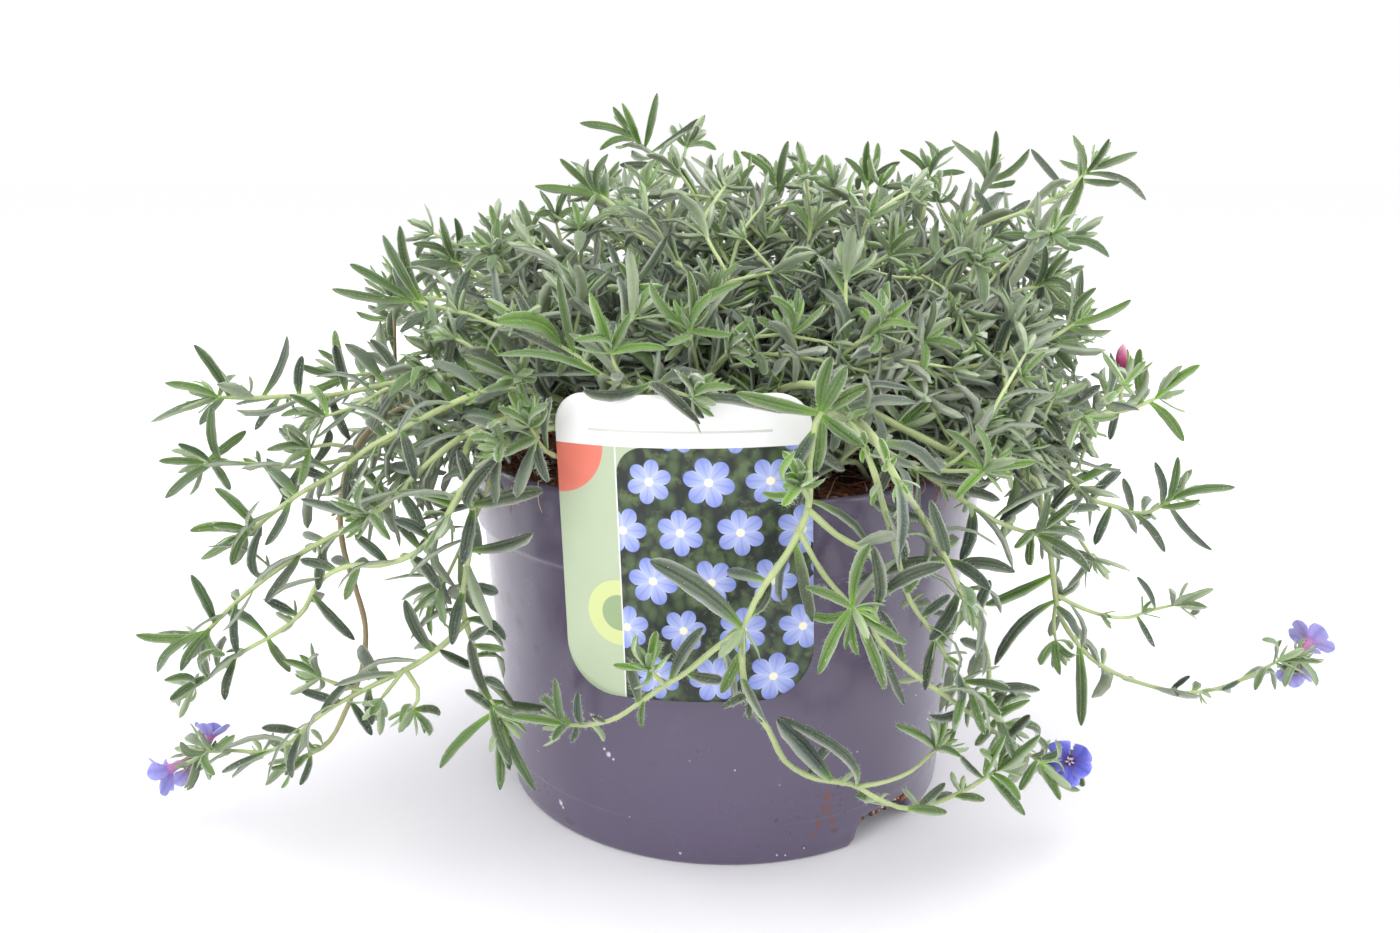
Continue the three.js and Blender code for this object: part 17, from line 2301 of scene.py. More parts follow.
-269,-537,1279,26,11,0,0,96,-12,26,670,-158,-494,1403,26,5,0,0,34,-59,-73,714,-139,-464,1177,28,6,0,0,34,-87,35,758,-233,-626,1327,33,3,14,0,82,-20,-53,802,-82,-487,1290,29,7,29,0,5,-80,-60,846,-154,-560,1195,30,12,45,0,
90,-22,38,890,-92,-597,1278,26,9,61,0,34,-6,-94,978,-91,-642,1198,25,8,92,0,94,25,-23]},
{"n": "shoot_back_5", "r": [75, 50], "o": 0, "k": 1, "f": 1, "p": [[258,517,1191],[352,546,1203],[473,536,1213],[662,552,1151]],
 "l": [142,358,489,1296,34,10,0,0,79,56,-24,186,334,674,1203,32,13,0,0,97,-19,13,230,436,465,1161,31,10,0,0,59,73,35,274,425,592,1341,34,5,0,0,83,3,-55,318,438,627,1096,35,6,0,0,82,-20,54,362,455,447,1271,33,5,0,0,77,60,
-20,406,432,668,1287,36,12,0,0,91,-41,-1,450,496,472,1124,26,6,0,0,70,21,69,494,479,500,1335,28,8,0,0,86,4,-51,538,520,597,1196,35,13,0,0,51,-79,32,582,533,414,1213,29,10,0,0,79,61,6,626,540,605,1332,26,12,0,0,85,-27,
-45,670,585,556,1080,32,5,0,0,77,-10,63,714,595,466,1264,30,6,0,0,66,45,-60,758,601,648,1195,30,12,14,0,75,-57,-35,802,624,461,1095,33,5,29,0,79,60,15,846,653,555,1251,24,4,45,0,63,5,-78,890,644,591,1116,27,10,61,0,82,
-50,29,934,692,496,1160,23,5,76,0,54,73,-43,978,727,603,1171,24,9,92,0,49,-51,-71]},
{"n": "shoot_top_left_2", "r": [75, 50], "o": 0, "k": 1, "f": 1, "p": [[-187,-79,1242],[-173,-72,1326],[-147,-64,1509],[-112,45,1559]],
 "l": [146,-205,28,1390,32,7,0,0,44,-62,65,198,-54,-121,1375,27,10,0,0,-45,36,82,249,-289,-103,1422,32,10,0,0,70,22,68,301,-95,30,1401,31,4,0,0,-25,-50,83,353,-178,-159,1424,32,12,0,0,24,69,68,405,-176,13,1467,36,6,0,0,
24,-74,62,456,-53,-156,1462,28,11,0,0,-33,30,89,508,-237,-103,1513,26,10,0,0,71,18,68,560,-140,48,1522,31,11,0,0,9,-47,88,664,-213,-85,1622,36,8,0,0,64,60,48,715,-114,95,1529,29,8,0,0,18,-7,98,767,-39,-18,1636,27,8,17,0,
-18,98,-3,819,-181,60,1583,26,11,35,0,85,52,-2,871,-70,56,1522,27,5,54,0,-38,64,66,922,-104,65,1611,28,10,72,0,17,75,-64,974,-131,117,1552,28,5,91,0,75,18,63]},
{"n": "shoot_centre_right", "r": [75, 50], "o": 0, "k": 1, "f": 1, "p": [[137,-269,1273],[67,-331,1260],[-75,-400,1290],[-217,-427,1246]],
 "l": [143,-47,-264,1207,28,11,0,0,-18,-98,-4,189,60,-397,1347,27,6,0,0,-65,-33,-69,282,-19,-314,1306,30,12,0,0,-26,-86,-44,328,44,-455,1302,34,12,0,0,-97,12,-21,375,-47,-315,1185,27,9,0,0,-55,-66,51,421,-15,-365,1364,
26,4,0,0,-74,-50,-46,467,-36,-496,1237,35,8,0,0,-83,18,53,514,-157,-303,1318,26,10,0,0,-38,-92,13,560,-24,-467,1389,35,7,0,0,-98,-17,-11,606,-143,-424,1179,26,12,0,0,-67,-30,68,653,-178,-352,1399,36,7,0,0,-69,-57,-45,
699,-144,-532,1282,34,7,0,0,-91,40,-11,745,-215,-347,1218,26,8,9,0,-57,-80,17,792,-246,-452,1341,32,11,26,0,-48,4,-88,838,-178,-481,1167,30,4,42,0,-97,19,16,884,-255,-374,1263,26,10,59,0,-38,-74,-55,931,-268,-501,1269,
27,4,75,0,-59,51,-62]},
{"n": "shoot_right_level", "r": [75, 50], "o": 0, "k": 1, "f": 1, "p": [[565,-401,1431],[621,-382,1411],[711,-376,1384],[865,-273,1168]],
 "l": [142,678,-440,1486,29,12,0,0,65,53,-54,186,631,-285,1412,28,7,0,0,87,-33,-35,274,709,-353,1482,28,4,0,0,53,11,-84,318,677,-304,1322,30,3,0,0,89,-36,28,406,715,-285,1498,34,10,0,0,86,-43,-28,538,710,-273,1377,31,13,
0,0,92,-37,-13,626,819,-288,1473,35,3,0,0,54,-1,-84,714,855,-404,1359,26,7,0,0,14,56,-82,758,739,-236,1329,34,3,14,0,63,-1,-78,802,798,-369,1221,25,6,29,0,46,88,-12,846,876,-278,1281,26,7,45,0,-3,9,-100,890,811,-242,
1145,27,4,61,0,97,-19,-13,934,913,-305,1151,27,3,76,0,-25,85,-46,978,899,-216,1154,24,7,92,0,17,-50,-85]},
{"n": "shoot_front_star_3", "r": [75, 50], "o": 0, "k": 1, "f": 1, "p": [[394,-474,1436],[444,-436,1400],[528,-420,1385],[684,-415,1173]],
 "l": [143,389,-370,1336,33,3,0,0,98,15,-14,189,556,-510,1378,27,9,0,0,24,85,-46,236,478,-339,1441,27,8,0,0,59,-4,-81,282,431,-443,1246,30,8,0,0,86,51,-3,328,550,-460,1457,28,11,0,0,48,56,-68,375,513,-319,1404,34,6,0,0,
88,-46,-8,421,592,-522,1344,28,10,0,0,63,64,43,514,567,-366,1359,35,10,0,0,63,-39,67,606,567,-321,1433,31,6,0,0,76,-24,-60,653,522,-473,1226,36,8,0,0,94,31,-11,745,562,-287,1260,26,10,9,0,69,-41,-59,792,629,-521,1221,29,
5,26,0,51,71,-49,838,702,-380,1266,31,3,42,0,-9,-32,-94,884,596,-395,1139,25,11,59,0,95,-13,-28,931,740,-470,1176,25,13,75,0,-5,58,-81,977,722,-368,1140,23,12,92,0,19,-78,-59]},
{"n": "shoot_back_1", "r": [75, 50], "o": 0, "k": 1, "f": 1, "p": [[-417,351,1180],[-484,349,1202],[-571,338,1245],[-683,290,1217]],
 "l": [149,-525,268,1216,28,13,0,0,-69,71,16,208,-544,450,1158,28,5,0,0,-73,-47,50,267,-513,323,1349,33,9,0,0,-96,5,-27,325,-618,272,1159,35,5,0,0,-46,38,80,384,-530,473,1286,29,3,0,0,-84,-43,32,443,-523,251,1297,28,5,0,
0,-89,35,28,501,-694,381,1208,35,13,0,0,-17,-34,92,560,-563,387,1393,31,6,0,0,-96,-29,-6,619,-604,222,1220,32,11,0,0,-88,28,38,677,-685,434,1231,29,6,0,0,-66,-74,10,736,-651,232,1360,31,4,6,0,-85,-12,-52,795,-673,279,
1154,29,7,27,0,-77,-14,62,853,-723,328,1262,30,8,48,0,-32,-68,-66,912,-692,205,1222,29,7,69,0,-85,35,-38,971,-729,304,1180,27,12,90,0,-39,-85,35]},
{"n": "shoot_top_fan", "r": [75, 50], "o": 0, "k": 1, "f": 1, "p": [[-47,-298,1217],[6,-300,1263],[79,-309,1320],[156,-241,1389]],
 "l": [149,67,-214,1242,34,10,0,0,40,-48,78,208,73,-420,1334,32,5,0,0,56,72,42,267,-15,-235,1345,33,6,0,0,89,-33,32,325,117,-311,1265,32,13,0,0,-2,1,100,384,-8,-383,1402,29,5,0,0,97,7,22,443,128,-180,1327,30,13,0,0,57,
-64,52,501,107,-404,1296,29,7,0,0,54,42,73,560,75,-297,1454,33,10,0,0,97,-23,-11,619,206,-211,1293,36,5,0,0,35,-32,88,677,166,-430,1414,33,7,0,0,57,71,42,736,81,-218,1421,27,4,6,0,99,5,11,795,237,-214,1355,30,12,27,0,
-22,27,94,853,158,-281,1468,31,11,48,0,51,85,-12,912,145,-169,1395,28,7,69,0,82,-22,53,971,225,-241,1412,21,7,90,0,-23,88,42]},
{"n": "shoot_centre_right", "r": [75, 50], "o": 0, "k": 1, "f": 1, "p": [[135,-224,1282],[130,-271,1263],[104,-329,1237],[108,-384,1173]],
 "l": [157,196,-298,1176,31,6,0,0,-47,-87,17,230,23,-345,1268,31,7,0,0,55,-68,-49,303,190,-402,1293,31,13,0,0,-63,-41,-66,450,46,-353,1323,34,12,0,0,-11,-67,-74,523,210,-414,1195,31,4,0,0,-79,-58,-20,597,-40,-330,1175,
32,11,0,0,20,-95,-25,670,132,-450,1281,30,9,0,0,-25,-38,-89,817,44,-430,1208,33,13,35,0,42,-29,-86,890,177,-399,1170,30,6,61,0,-49,-46,-74]},
{"n": "shoot_right_bud", "r": [75, 50], "o": 0, "k": 1, "f": 1, "p": [[734,-425,1234],[790,-415,1208],[861,-404,1205],[930,-405,1118]],
 "l": [154,782,-449,1082,30,13,0,0,94,32,9,289,817,-316,1174,27,4,0,0,91,-37,-16,492,934,-346,1117,29,4,0,0,68,-13,72,628,904,-277,1236,30,8,0,0,87,-26,-41,831,902,-325,1069,25,10,40,0,72,-56,-40]},
{"n": "shoot_centre_right", "r": [75, 50], "o": 0, "k": 1, "f": 1, "p": [[172,-321,1376],[220,-337,1361],[276,-351,1373],[402,-320,1339]],
 "l": [154,299,-328,1463,35,12,0,0,63,-35,-69,222,264,-288,1231,34,9,0,0,82,-54,20,289,276,-482,1418,26,6,0,0,89,22,-40,357,333,-278,1419,28,9,0,0,55,-81,-21,425,309,-442,1310,35,5,0,0,63,7,77,492,252,-376,1487,27,4,0,0,
95,-27,-14,560,350,-270,1342,27,13,0,0,65,-61,45,628,350,-432,1378,29,8,0,0,69,72,1,695,344,-273,1462,33,9,0,0,87,-10,-49,763,331,-332,1265,28,11,15,0,95,18,24,831,418,-370,1401,29,3,40,0,53,55,-65,898,427,-258,1338,28,
8,64,0,68,-66,-32,966,463,-338,1303,25,7,88,0,34,89,31]},
{"n": "shoot_back_12", "r": [75, 50], "o": 0, "k": 1, "f": 1, "p": [[516,-38,1279],[563,-28,1373],[629,0,1511],[659,10,1632]],
 "l": [143,502,-50,1436,35,9,0,0,93,23,29,189,611,61,1361,30,9,0,0,16,-42,90,236,621,-131,1447,29,8,0,0,17,77,61,282,490,30,1442,28,10,0,0,75,-12,65,328,720,16,1380,32,11,0,0,-5,1,100,375,571,-87,1509,31,4,0,0,62,70,35,
421,591,65,1480,30,6,0,0,56,-57,60,467,727,-71,1480,34,10,0,0,-13,52,85,514,509,-21,1595,35,5,0,0,82,26,51,560,715,124,1488,27,4,0,0,12,-24,96,606,652,-92,1557,33,10,0,0,29,66,69,653,579,75,1592,28,11,0,0,72,-27,64,699,
743,6,1571,35,6,0,0,-40,13,91,745,580,-53,1628,31,8,9,0,61,41,68,792,674,121,1628,31,4,26,0,12,-54,83,838,707,-65,1642,31,11,42,0,-16,60,78,884,614,26,1675,25,6,59,0,89,-17,42,931,727,44,1682,23,7,75,0,-59,-34,73,977,
659,-19,1691,26,13,92,0,42,84,35]},
{"n": "shoot_top_front", "r": [75, 50], "o": 0, "k": 1, "f": 1, "p": [[216,-159,1462],[201,-107,1519],[144,-31,1646],[-2,117,1668]],
 "l": [186,182,-16,1485,28,10,0,0,0,3,100,274,64,-120,1567,29,8,0,0,27,72,64,318,229,29,1559,35,4,0,0,-58,-15,80,406,53,-19,1558,30,11,0,0,20,21,96,450,281,-26,1634,33,8,0,0,-67,21,71,538,116,93,1591,34,3,0,0,-22,-2,98,
758,26,65,1609,26,11,14,0,-17,48,86,802,72,142,1733,33,7,29,0,-88,13,-45,846,-18,43,1686,23,11,45,0,-6,98,-17,890,25,173,1612,22,9,61,0,-85,7,53,934,-28,146,1731,25,12,76,0,-46,42,-78,978,-61,137,1654,25,11,92,0,25,81,
53]},
{"n": "shoot_top_left", "r": [75, 50], "o": 0, "k": 1, "f": 1, "p": [[-119,138,1252],[-54,89,1304],[52,18,1390],[222,-53,1361]],
 "l": [142,-40,-1,1258,28,8,0,0,53,14,83,186,-90,102,1392,33,7,0,0,83,-55,-2,274,-56,-49,1369,27,6,0,0,92,23,31,318,-3,119,1397,31,6,0,0,48,-88,-2,362,44,13,1305,36,12,0,0,7,1,100,406,-68,26,1432,27,8,0,0,95,-27,17,450,
73,92,1389,28,5,0,0,-2,-88,47,494,27,-84,1377,32,11,0,0,63,30,72,538,2,80,1506,34,12,0,0,76,-62,16,582,163,21,1342,31,3,0,0,15,-50,85,626,46,-77,1452,29,4,0,0,99,11,2,670,181,78,1474,27,12,0,0,52,-83,-20,714,147,-75,
1308,29,12,0,0,75,1,66,758,181,-81,1505,35,6,14,0,74,-13,-66,802,217,34,1343,28,5,29,0,43,-90,8,846,189,-114,1357,32,9,45,0,87,48,-9,890,251,-20,1432,27,9,61,0,51,-50,-69,934,240,-49,1306,28,8,76,0,65,-43,62,978,261,
-113,1391,22,12,92,0,71,27,-65]},
{"n": "shoot_right_level", "r": [75, 50], "o": 0, "k": 1, "f": 1, "p": [[712,-411,1319],[743,-384,1337],[775,-342,1382],[807,-295,1396]],
 "l": [160,824,-434,1393,32,12,0,0,32,95,2,240,700,-277,1422,33,9,0,0,97,21,10,400,752,-420,1452,26,4,0,0,50,81,32,480,737,-260,1378,33,12,0,0,68,-2,73,560,890,-363,1412,28,13,0,0,-16,79,59,720,826,-244,1320,35,7,0,0,39,
40,83,880,799,-191,1427,27,6,57,0,99,1,-13,960,870,-268,1380,28,5,86,0,-25,77,59]},
{"n": "shoot_centre_right", "r": [75, 50], "o": 0, "k": 1, "f": 1, "p": [[125,-241,1395],[131,-284,1410],[144,-352,1438],[188,-437,1395]],
 "l": [157,247,-314,1469,35,8,0,0,-44,-90,5,230,88,-399,1373,31,12,0,0,54,-35,77,303,122,-317,1533,35,9,0,0,23,-93,-27,377,245,-369,1389,36,13,0,0,-33,-68,65,450,12,-386,1468,35,11,0,0,61,-67,43,523,215,-362,1558,28,10,
0,0,-27,-95,-15,597,163,-438,1376,28,7,0,0,14,-48,86,670,111,-462,1525,35,5,0,0,58,-61,-54,743,311,-361,1414,32,9,8,0,2,-95,-32,817,135,-462,1361,28,5,35,0,93,-35,1,890,229,-487,1436,30,5,61,0,2,-28,-96,963,237,-458,
1326,22,12,87,0,-7,-94,33]},
{"n": "shoot_top_left", "r": [75, 50], "o": 0, "k": 1, "f": 1, "p": [[-120,134,1262],[-109,175,1262],[-102,242,1274],[-52,376,1164]],
 "l": [151,-120,265,1374,32,4,0,0,44,64,-63,214,-147,235,1131,33,3,0,0,40,83,38,277,3,192,1335,35,8,0,0,-12,98,-16,340,-220,234,1319,34,4,0,0,48,88,4,403,-43,316,1240,26,6,0,0,-43,38,82,466,-94,210,1384,32,10,0,0,-11,99,
-11,529,-201,283,1240,27,6,0,0,41,76,51,591,10,310,1285,35,6,0,0,-60,80,-8,654,-146,376,1332,35,10,0,0,49,46,-74,717,-89,281,1109,27,11,0,0,32,93,15,780,3,363,1257,30,6,21,0,-26,42,-87,843,-149,412,1171,26,8,44,0,81,30,
-50,906,7,364,1111,28,10,66,0,-41,91,-6,969,-32,446,1166,25,7,89,0,8,-13,-99]},
{"n": "shoot_top_front", "r": [75, 50], "o": 0, "k": 1, "f": 1, "p": [[252,-183,1324],[273,-126,1347],[282,-33,1397],[233,127,1502]],
 "l": [144,315,-158,1462,31,11,0,0,24,96,-12,193,198,-24,1336,34,10,0,0,81,42,41,242,403,-68,1362,31,8,0,0,-50,78,37,291,227,-100,1476,35,10,0,0,45,89,-8,340,269,-3,1292,30,6,0,0,28,41,87,389,357,-73,1444,29,13,0,0,-34,
93,-12,438,189,-36,1414,35,10,0,0,67,70,25,487,382,7,1321,27,5,0,0,-26,61,74,536,292,-93,1510,34,9,0,0,7,99,11,584,204,46,1373,32,6,0,0,53,45,72,633,411,37,1450,28,6,0,0,-62,69,37,682,189,-16,1530,31,11,0,0,22,97,7,731,
257,112,1360,31,8,4,0,-16,39,91,780,311,56,1538,31,4,21,0,-61,79,-6,829,188,79,1481,25,4,39,0,57,74,35,878,284,172,1484,30,5,56,0,-79,9,61,927,223,120,1555,22,8,74,0,-12,91,-38,976,191,195,1519,24,8,91,0,55,5,83]},
{"n": "shoot_right_fan", "r": [75, 50], "o": 0, "k": 1, "f": 1, "p": [[389,-279,1161],[419,-298,1140],[460,-332,1119],[528,-326,1097]],
 "l": [164,536,-257,1143,26,6,0,0,14,-76,-64,340,487,-383,1218,33,6,0,0,53,-31,-79,428,522,-309,1074,34,3,0,0,3,-100,6,516,377,-445,1110,32,4,0,0,87,-38,-31,604,550,-307,1197,30,10,0,0,56,-57,-60,780,607,-389,1158,32,11,
21,0,48,48,-73,868,556,-259,1094,27,4,53,0,72,-62,-29,956,577,-359,1058,24,10,84,0,59,78,22]},
{"n": "shoot_centre_right", "r": [75, 50], "o": 0, "k": 1, "f": 1, "p": [[136,-169,1142],[148,-190,1179],[168,-212,1241],[194,-259,1265]],
 "l": [160,173,-319,1209,34,5,0,0,12,36,92,240,99,-183,1301,26,7,0,0,69,-68,24,320,257,-199,1253,31,13,0,0,-52,-51,69,400,133,-314,1286,31,8,0,0,53,48,70,480,154,-154,1311,35,10,0,0,44,-82,36,560,284,-284,1294,30,13,0,0,
-43,13,89,640,98,-267,1354,30,12,0,0,88,-31,37,720,287,-225,1324,28,3,0,0,-20,-96,21,800,172,-374,1216,29,5,29,0,66,-22,72,880,198,-281,1367,28,13,57,0,47,-81,-35,960,272,-306,1257,24,10,86,0,-40,-67,62]},
{"n": "shoot_left_woody", "r": [75, 50], "o": 0, "k": 1, "f": 1, "p": [[-442,-125,1038],[-504,-88,1059],[-572,0,1082],[-672,77,1054]],
 "l": [147,-556,-126,1169,33,12,0,0,-64,66,-38,258,-496,0,1149,36,9,0,0,-97,13,-19,312,-651,-145,1111,28,10,0,0,-30,95,10,422,-554,-21,1195,26,11,0,0,-53,74,-41,532,-499,77,1116,36,6,0,0,-94,33,5,588,-638,-29,1155,27,4,
0,0,-27,94,-21,698,-590,106,1195,30,5,0,0,-78,43,-45,863,-719,82,1121,31,5,51,0,-31,47,-83,973,-687,147,1072,24,5,90,0,-82,-14,-55]},
{"n": "shoot_left_top", "r": [75, 50], "o": 0, "k": 1, "f": 1, "p": [[-223,-97,1054],[-254,-123,1115],[-291,-149,1218],[-368,-182,1260]],
 "l": [151,-177,-124,1192,31,11,0,0,-84,-37,40,277,-277,-37,1179,29,8,0,0,-32,-70,63,340,-186,-224,1185,31,4,0,0,-65,7,76,403,-360,-142,1199,35,6,0,0,55,-20,81,466,-215,-85,1290,29,4,0,0,-67,-58,46,529,-318,-272,1274,27,
6,0,0,-13,61,78,591,-346,-76,1260,30,6,0,0,-6,-71,71,654,-244,-222,1340,34,4,0,0,-94,0,34,717,-431,-194,1176,28,8,0,0,-30,-23,93,780,-346,-125,1328,32,9,21,0,-77,-64,-3,843,-368,-269,1266,26,6,44,0,-87,39,30,906,-461,
-140,1253,25,10,66,0,-22,-85,48,969,-395,-208,1332,28,9,89,0,-88,-15,-46]},
{"n": "shoot_left_top", "r": [75, 50], "o": 0, "k": 1, "f": 1, "p": [[-256,-232,1255],[-287,-247,1293],[-341,-257,1372],[-372,-272,1397]],
 "l": [160,-418,-209,1335,36,9,0,0,12,-75,64,240,-229,-271,1437,36,7,0,0,-94,-22,25,320,-397,-330,1279,28,12,0,0,-21,14,97,400,-324,-169,1417,35,9,0,0,-59,-72,38,480,-306,-350,1406,30,7,0,0,-68,43,59,560,-448,-220,1393,
27,11,0,0,21,-40,89,640,-313,-227,1528,35,9,0,0,-92,-33,20,720,-395,-384,1381,29,12,0,0,-58,23,78,800,-485,-231,1452,33,11,29,0,-9,-96,28,880,-392,-334,1488,29,10,57,0,-95,-4,-32,960,-452,-319,1394,28,3,86,0,-1,2,100]},
{"n": "shoot_centre_right", "r": [75, 50], "o": 0, "k": 1, "f": 1, "p": [[171,-311,1381],[180,-396,1316],[202,-450,1273],[200,-599,1123]],
 "l": [143,276,-392,1318,29,6,0,0,-47,-71,-53,189,97,-418,1243,32,8,0,0,68,-72,-13,236,217,-515,1412,30,10,0,0,0,-48,-87,282,243,-352,1225,30,13,0,0,-7,-94,-35,328,68,-505,1316,31,8,0,0,52,-53,-66,375,292,-446,1327,30,9,
0,0,-15,-69,-71,421,150,-431,1189,29,7,0,0,66,-75,-7,514,333,-353,1225,29,6,0,0,22,-89,-41,560,125,-541,1214,31,13,0,0,89,-31,-34,606,286,-557,1304,28,9,0,0,-21,-29,-93,653,230,-412,1132,32,5,0,0,-1,-97,-23,699,123,-583,
1249,27,9,0,0,50,-24,-83,745,305,-569,1192,34,11,9,0,-67,-39,-63,792,147,-518,1125,26,7,26,0,50,-86,-12,838,194,-640,1219,24,9,42,0,2,-14,-99,931,115,-627,1110,23,3,75,0,65,-46,-60]},
{"n": "shoot_right_fan", "r": [75, 50], "o": 0, "k": 1, "f": 1, "p": [[582,-256,1476],[628,-247,1468],[688,-222,1441],[787,-207,1337]],
 "l": [214,685,-273,1392,30,10,0,0,70,47,53,340,631,-137,1415,33,6,0,0,99,-7,-11,403,776,-323,1430,30,7,0,0,48,87,-12,466,692,-163,1533,35,7,0,0,78,13,-61,529,714,-183,1316,32,11,0,0,87,26,42,591,791,-266,1485,27,6,0,0,
39,56,-73,654,725,-110,1416,29,7,0,0,71,-39,-59,717,694,-297,1352,30,9,0,0,78,40,-48,780,843,-196,1462,25,6,21,0,37,5,-93,843,761,-156,1285,30,9,44,0,87,-49,-8,906,830,-263,1318,30,12,66,0,17,80,-58,969,854,-160,1313,24,
10,89,0,2,-61,-80]},
{"n": "shoot_top_left", "r": [75, 50], "o": 0, "k": 1, "f": 1, "p": [[-149,75,1509],[-157,124,1549],[-151,183,1583],[-180,324,1603]],
 "l": [151,-194,54,1679,30,3,0,0,-6,96,26,214,-217,232,1535,26,4,0,0,28,14,95,277,-60,142,1632,30,5,0,0,-51,80,31,340,-291,157,1637,26,3,0,0,44,82,37,403,-71,270,1574,33,6,0,0,-45,17,88,466,-135,138,1710,35,9,0,0,16,99,
1,529,-209,259,1574,31,7,0,0,66,33,67,591,-26,239,1615,34,9,0,0,-56,77,30,654,-238,216,1709,27,13,0,0,20,97,-14,717,-173,301,1516,27,5,0,0,-9,56,82,780,-121,306,1671,32,11,21,0,-57,70,-43,843,-257,308,1611,27,12,44,0,52,
86,2,906,-151,375,1588,27,10,66,0,-87,23,45,969,-194,362,1654,23,10,89,0,-4,70,-71]},
{"n": "shoot_right_upper", "r": [75, 50], "o": 0, "k": 1, "f": 1, "p": [[335,-36,1211],[402,-44,1210],[496,-57,1229],[626,-66,1092]],
 "l": [147,417,-173,1150,26,5,0,0,94,31,14,203,433,-21,1311,34,9,0,0,86,-22,-46,258,477,18,1088,35,5,0,0,82,-35,45,312,444,-133,1260,34,13,0,0,91,37,-19,367,471,91,1304,32,5,0,0,87,-47,13,422,567,-133,1172,27,7,0,0,44,
29,85,477,437,-76,1340,34,8,0,0,100,-4,1,532,566,30,1220,31,6,0,0,55,-67,50,588,525,-190,1228,27,11,0,0,93,37,3,642,586,-22,1277,33,11,0,0,49,-40,-77,698,520,-47,1097,33,8,0,0,98,-16,9,752,639,-142,1198,29,11,12,0,26,42,
-87,807,605,11,1138,30,13,31,0,39,-68,-62,863,592,-111,1072,29,6,51,0,79,59,-14,917,693,-66,1110,28,9,71,0,-19,-4,-98]},
{"n": "shoot_back_11", "r": [75, 50], "o": 0, "k": 1, "f": 1, "p": [[-320,-21,1083],[-347,-34,1181],[-389,-81,1334],[-415,-84,1435]],
 "l": [144,-446,-82,1205,28,10,0,0,45,30,84,193,-328,81,1243,26,11,0,0,-37,-64,67,242,-287,-127,1214,35,3,0,0,-52,25,82,291,-493,-27,1213,27,9,0,0,29,-23,93,340,-304,12,1302,29,6,0,0,-63,-61,48,389,-365,-167,1268,29,5,0,
0,-27,45,85,438,-461,-5,1328,33,10,0,0,32,-72,62,487,-290,-73,1331,31,6,0,0,-72,-28,63,536,-460,-147,1294,32,11,0,0,15,6,99,584,-389,20,1425,28,5,0,0,-27,-79,55,633,-362,-166,1393,35,7,0,0,-56,43,70,682,-539,-27,1395,31,
5,0,0,19,-38,90,731,-275,-83,1469,28,4,4,0,-68,-12,73,780,-497,-138,1434,27,5,21,0,37,34,86,829,-391,-19,1494,30,9,39,0,-54,-69,48,878,-416,-131,1483,23,11,56,0,-29,85,44,927,-467,-49,1470,27,4,74,0,45,-47,76,976,-394,
-75,1502,21,6,91,0,-94,-20,27]},
{"n": "shoot_right_level", "r": [75, 50], "o": 0, "k": 1, "f": 1, "p": [[316,-520,1269],[387,-499,1303],[456,-464,1402],[575,-351,1373]],
 "l": [146,393,-416,1240,36,11,0,0,83,-16,54,198,453,-567,1328,32,5,0,0,47,87,14,249,402,-411,1419,32,4,0,0,98,-17,-13,301,523,-459,1292,32,11,0,0,1,9,100,353,382,-562,1401,33,9,0,0,72,54,44,405,416,-340,1400,35,6,0,0,
53,-42,73,508,335,-489,1476,33,9,0,0,78,23,58,560,528,-361,1398,34,7,0,0,15,-28,95,612,521,-522,1483,29,10,0,0,28,93,24,664,427,-343,1487,27,8,0,0,98,18,6,715,555,-435,1333,28,5,0,0,35,73,59,767,554,-412,1499,30,10,17,0,
54,65,-53,819,527,-284,1340,26,5,35,0,99,-10,13,871,637,-392,1365,31,4,54,0,-10,98,-15,922,573,-309,1418,26,5,72,0,63,14,-76,974,618,-302,1327,27,5,91,0,49,25,83]},
{"n": "shoot_left_top", "r": [75, 50], "o": 0, "k": 1, "f": 1, "p": [[-240,-332,1374],[-265,-350,1360],[-302,-370,1369],[-381,-373,1328]],
 "l": [164,-397,-323,1399,30,12,0,0,-24,-68,-69,252,-260,-493,1374,32,11,0,0,-89,-2,-45,340,-376,-317,1258,29,5,0,0,-56,-75,36,428,-300,-360,1509,35,4,0,0,-76,-63,-16,516,-314,-477,1343,36,12,0,0,-77,9,63,604,-383,-279,
1384,30,3,0,0,-70,-72,-2,692,-379,-456,1428,33,3,0,0,-76,19,-62,780,-377,-367,1213,29,4,21,0,-94,-9,33,868,-431,-342,1353,25,4,53,0,-23,-42,-88,956,-430,-418,1302,21,5,84,0,-47,83,-30]},
{"n": "shoot_top_right_2", "r": [75, 50], "o": 0, "k": 1, "f": 1, "p": [[474,229,1364],[543,255,1365],[614,308,1378],[743,372,1271]],
 "l": [147,571,235,1451,35,7,0,0,74,38,-55,203,561,355,1328,30,5,0,0,92,-29,25,258,630,181,1360,28,4,0,0,54,84,7,312,555,349,1499,29,4,0,0,93,24,-28,367,634,336,1290,33,8,0,0,52,25,82,422,648,215,1489,29,8,0,0,51,86,0,
477,570,426,1439,29,3,0,0,99,-5,13,532,721,310,1358,33,11,0,0,-4,78,62,588,631,329,1505,29,12,0,0,74,54,-39,642,635,386,1310,28,9,0,0,94,-5,33,698,743,265,1362,31,13,0,0,28,81,-51,752,675,424,1383,29,8,12,0,67,-3,-74,
807,674,311,1218,32,4,31,0,82,56,-4,863,792,355,1334,28,7,51,0,8,36,-93,917,738,447,1234,27,6,71,0,83,-47,-29,973,781,344,1238,27,4,90,0,26,94,-23]},
{"n": "shoot_top_right_2", "r": [75, 50], "o": 0, "k": 1, "f": 1, "p": [[302,275,1116],[284,286,1191],[247,307,1310],[162,337,1379]],
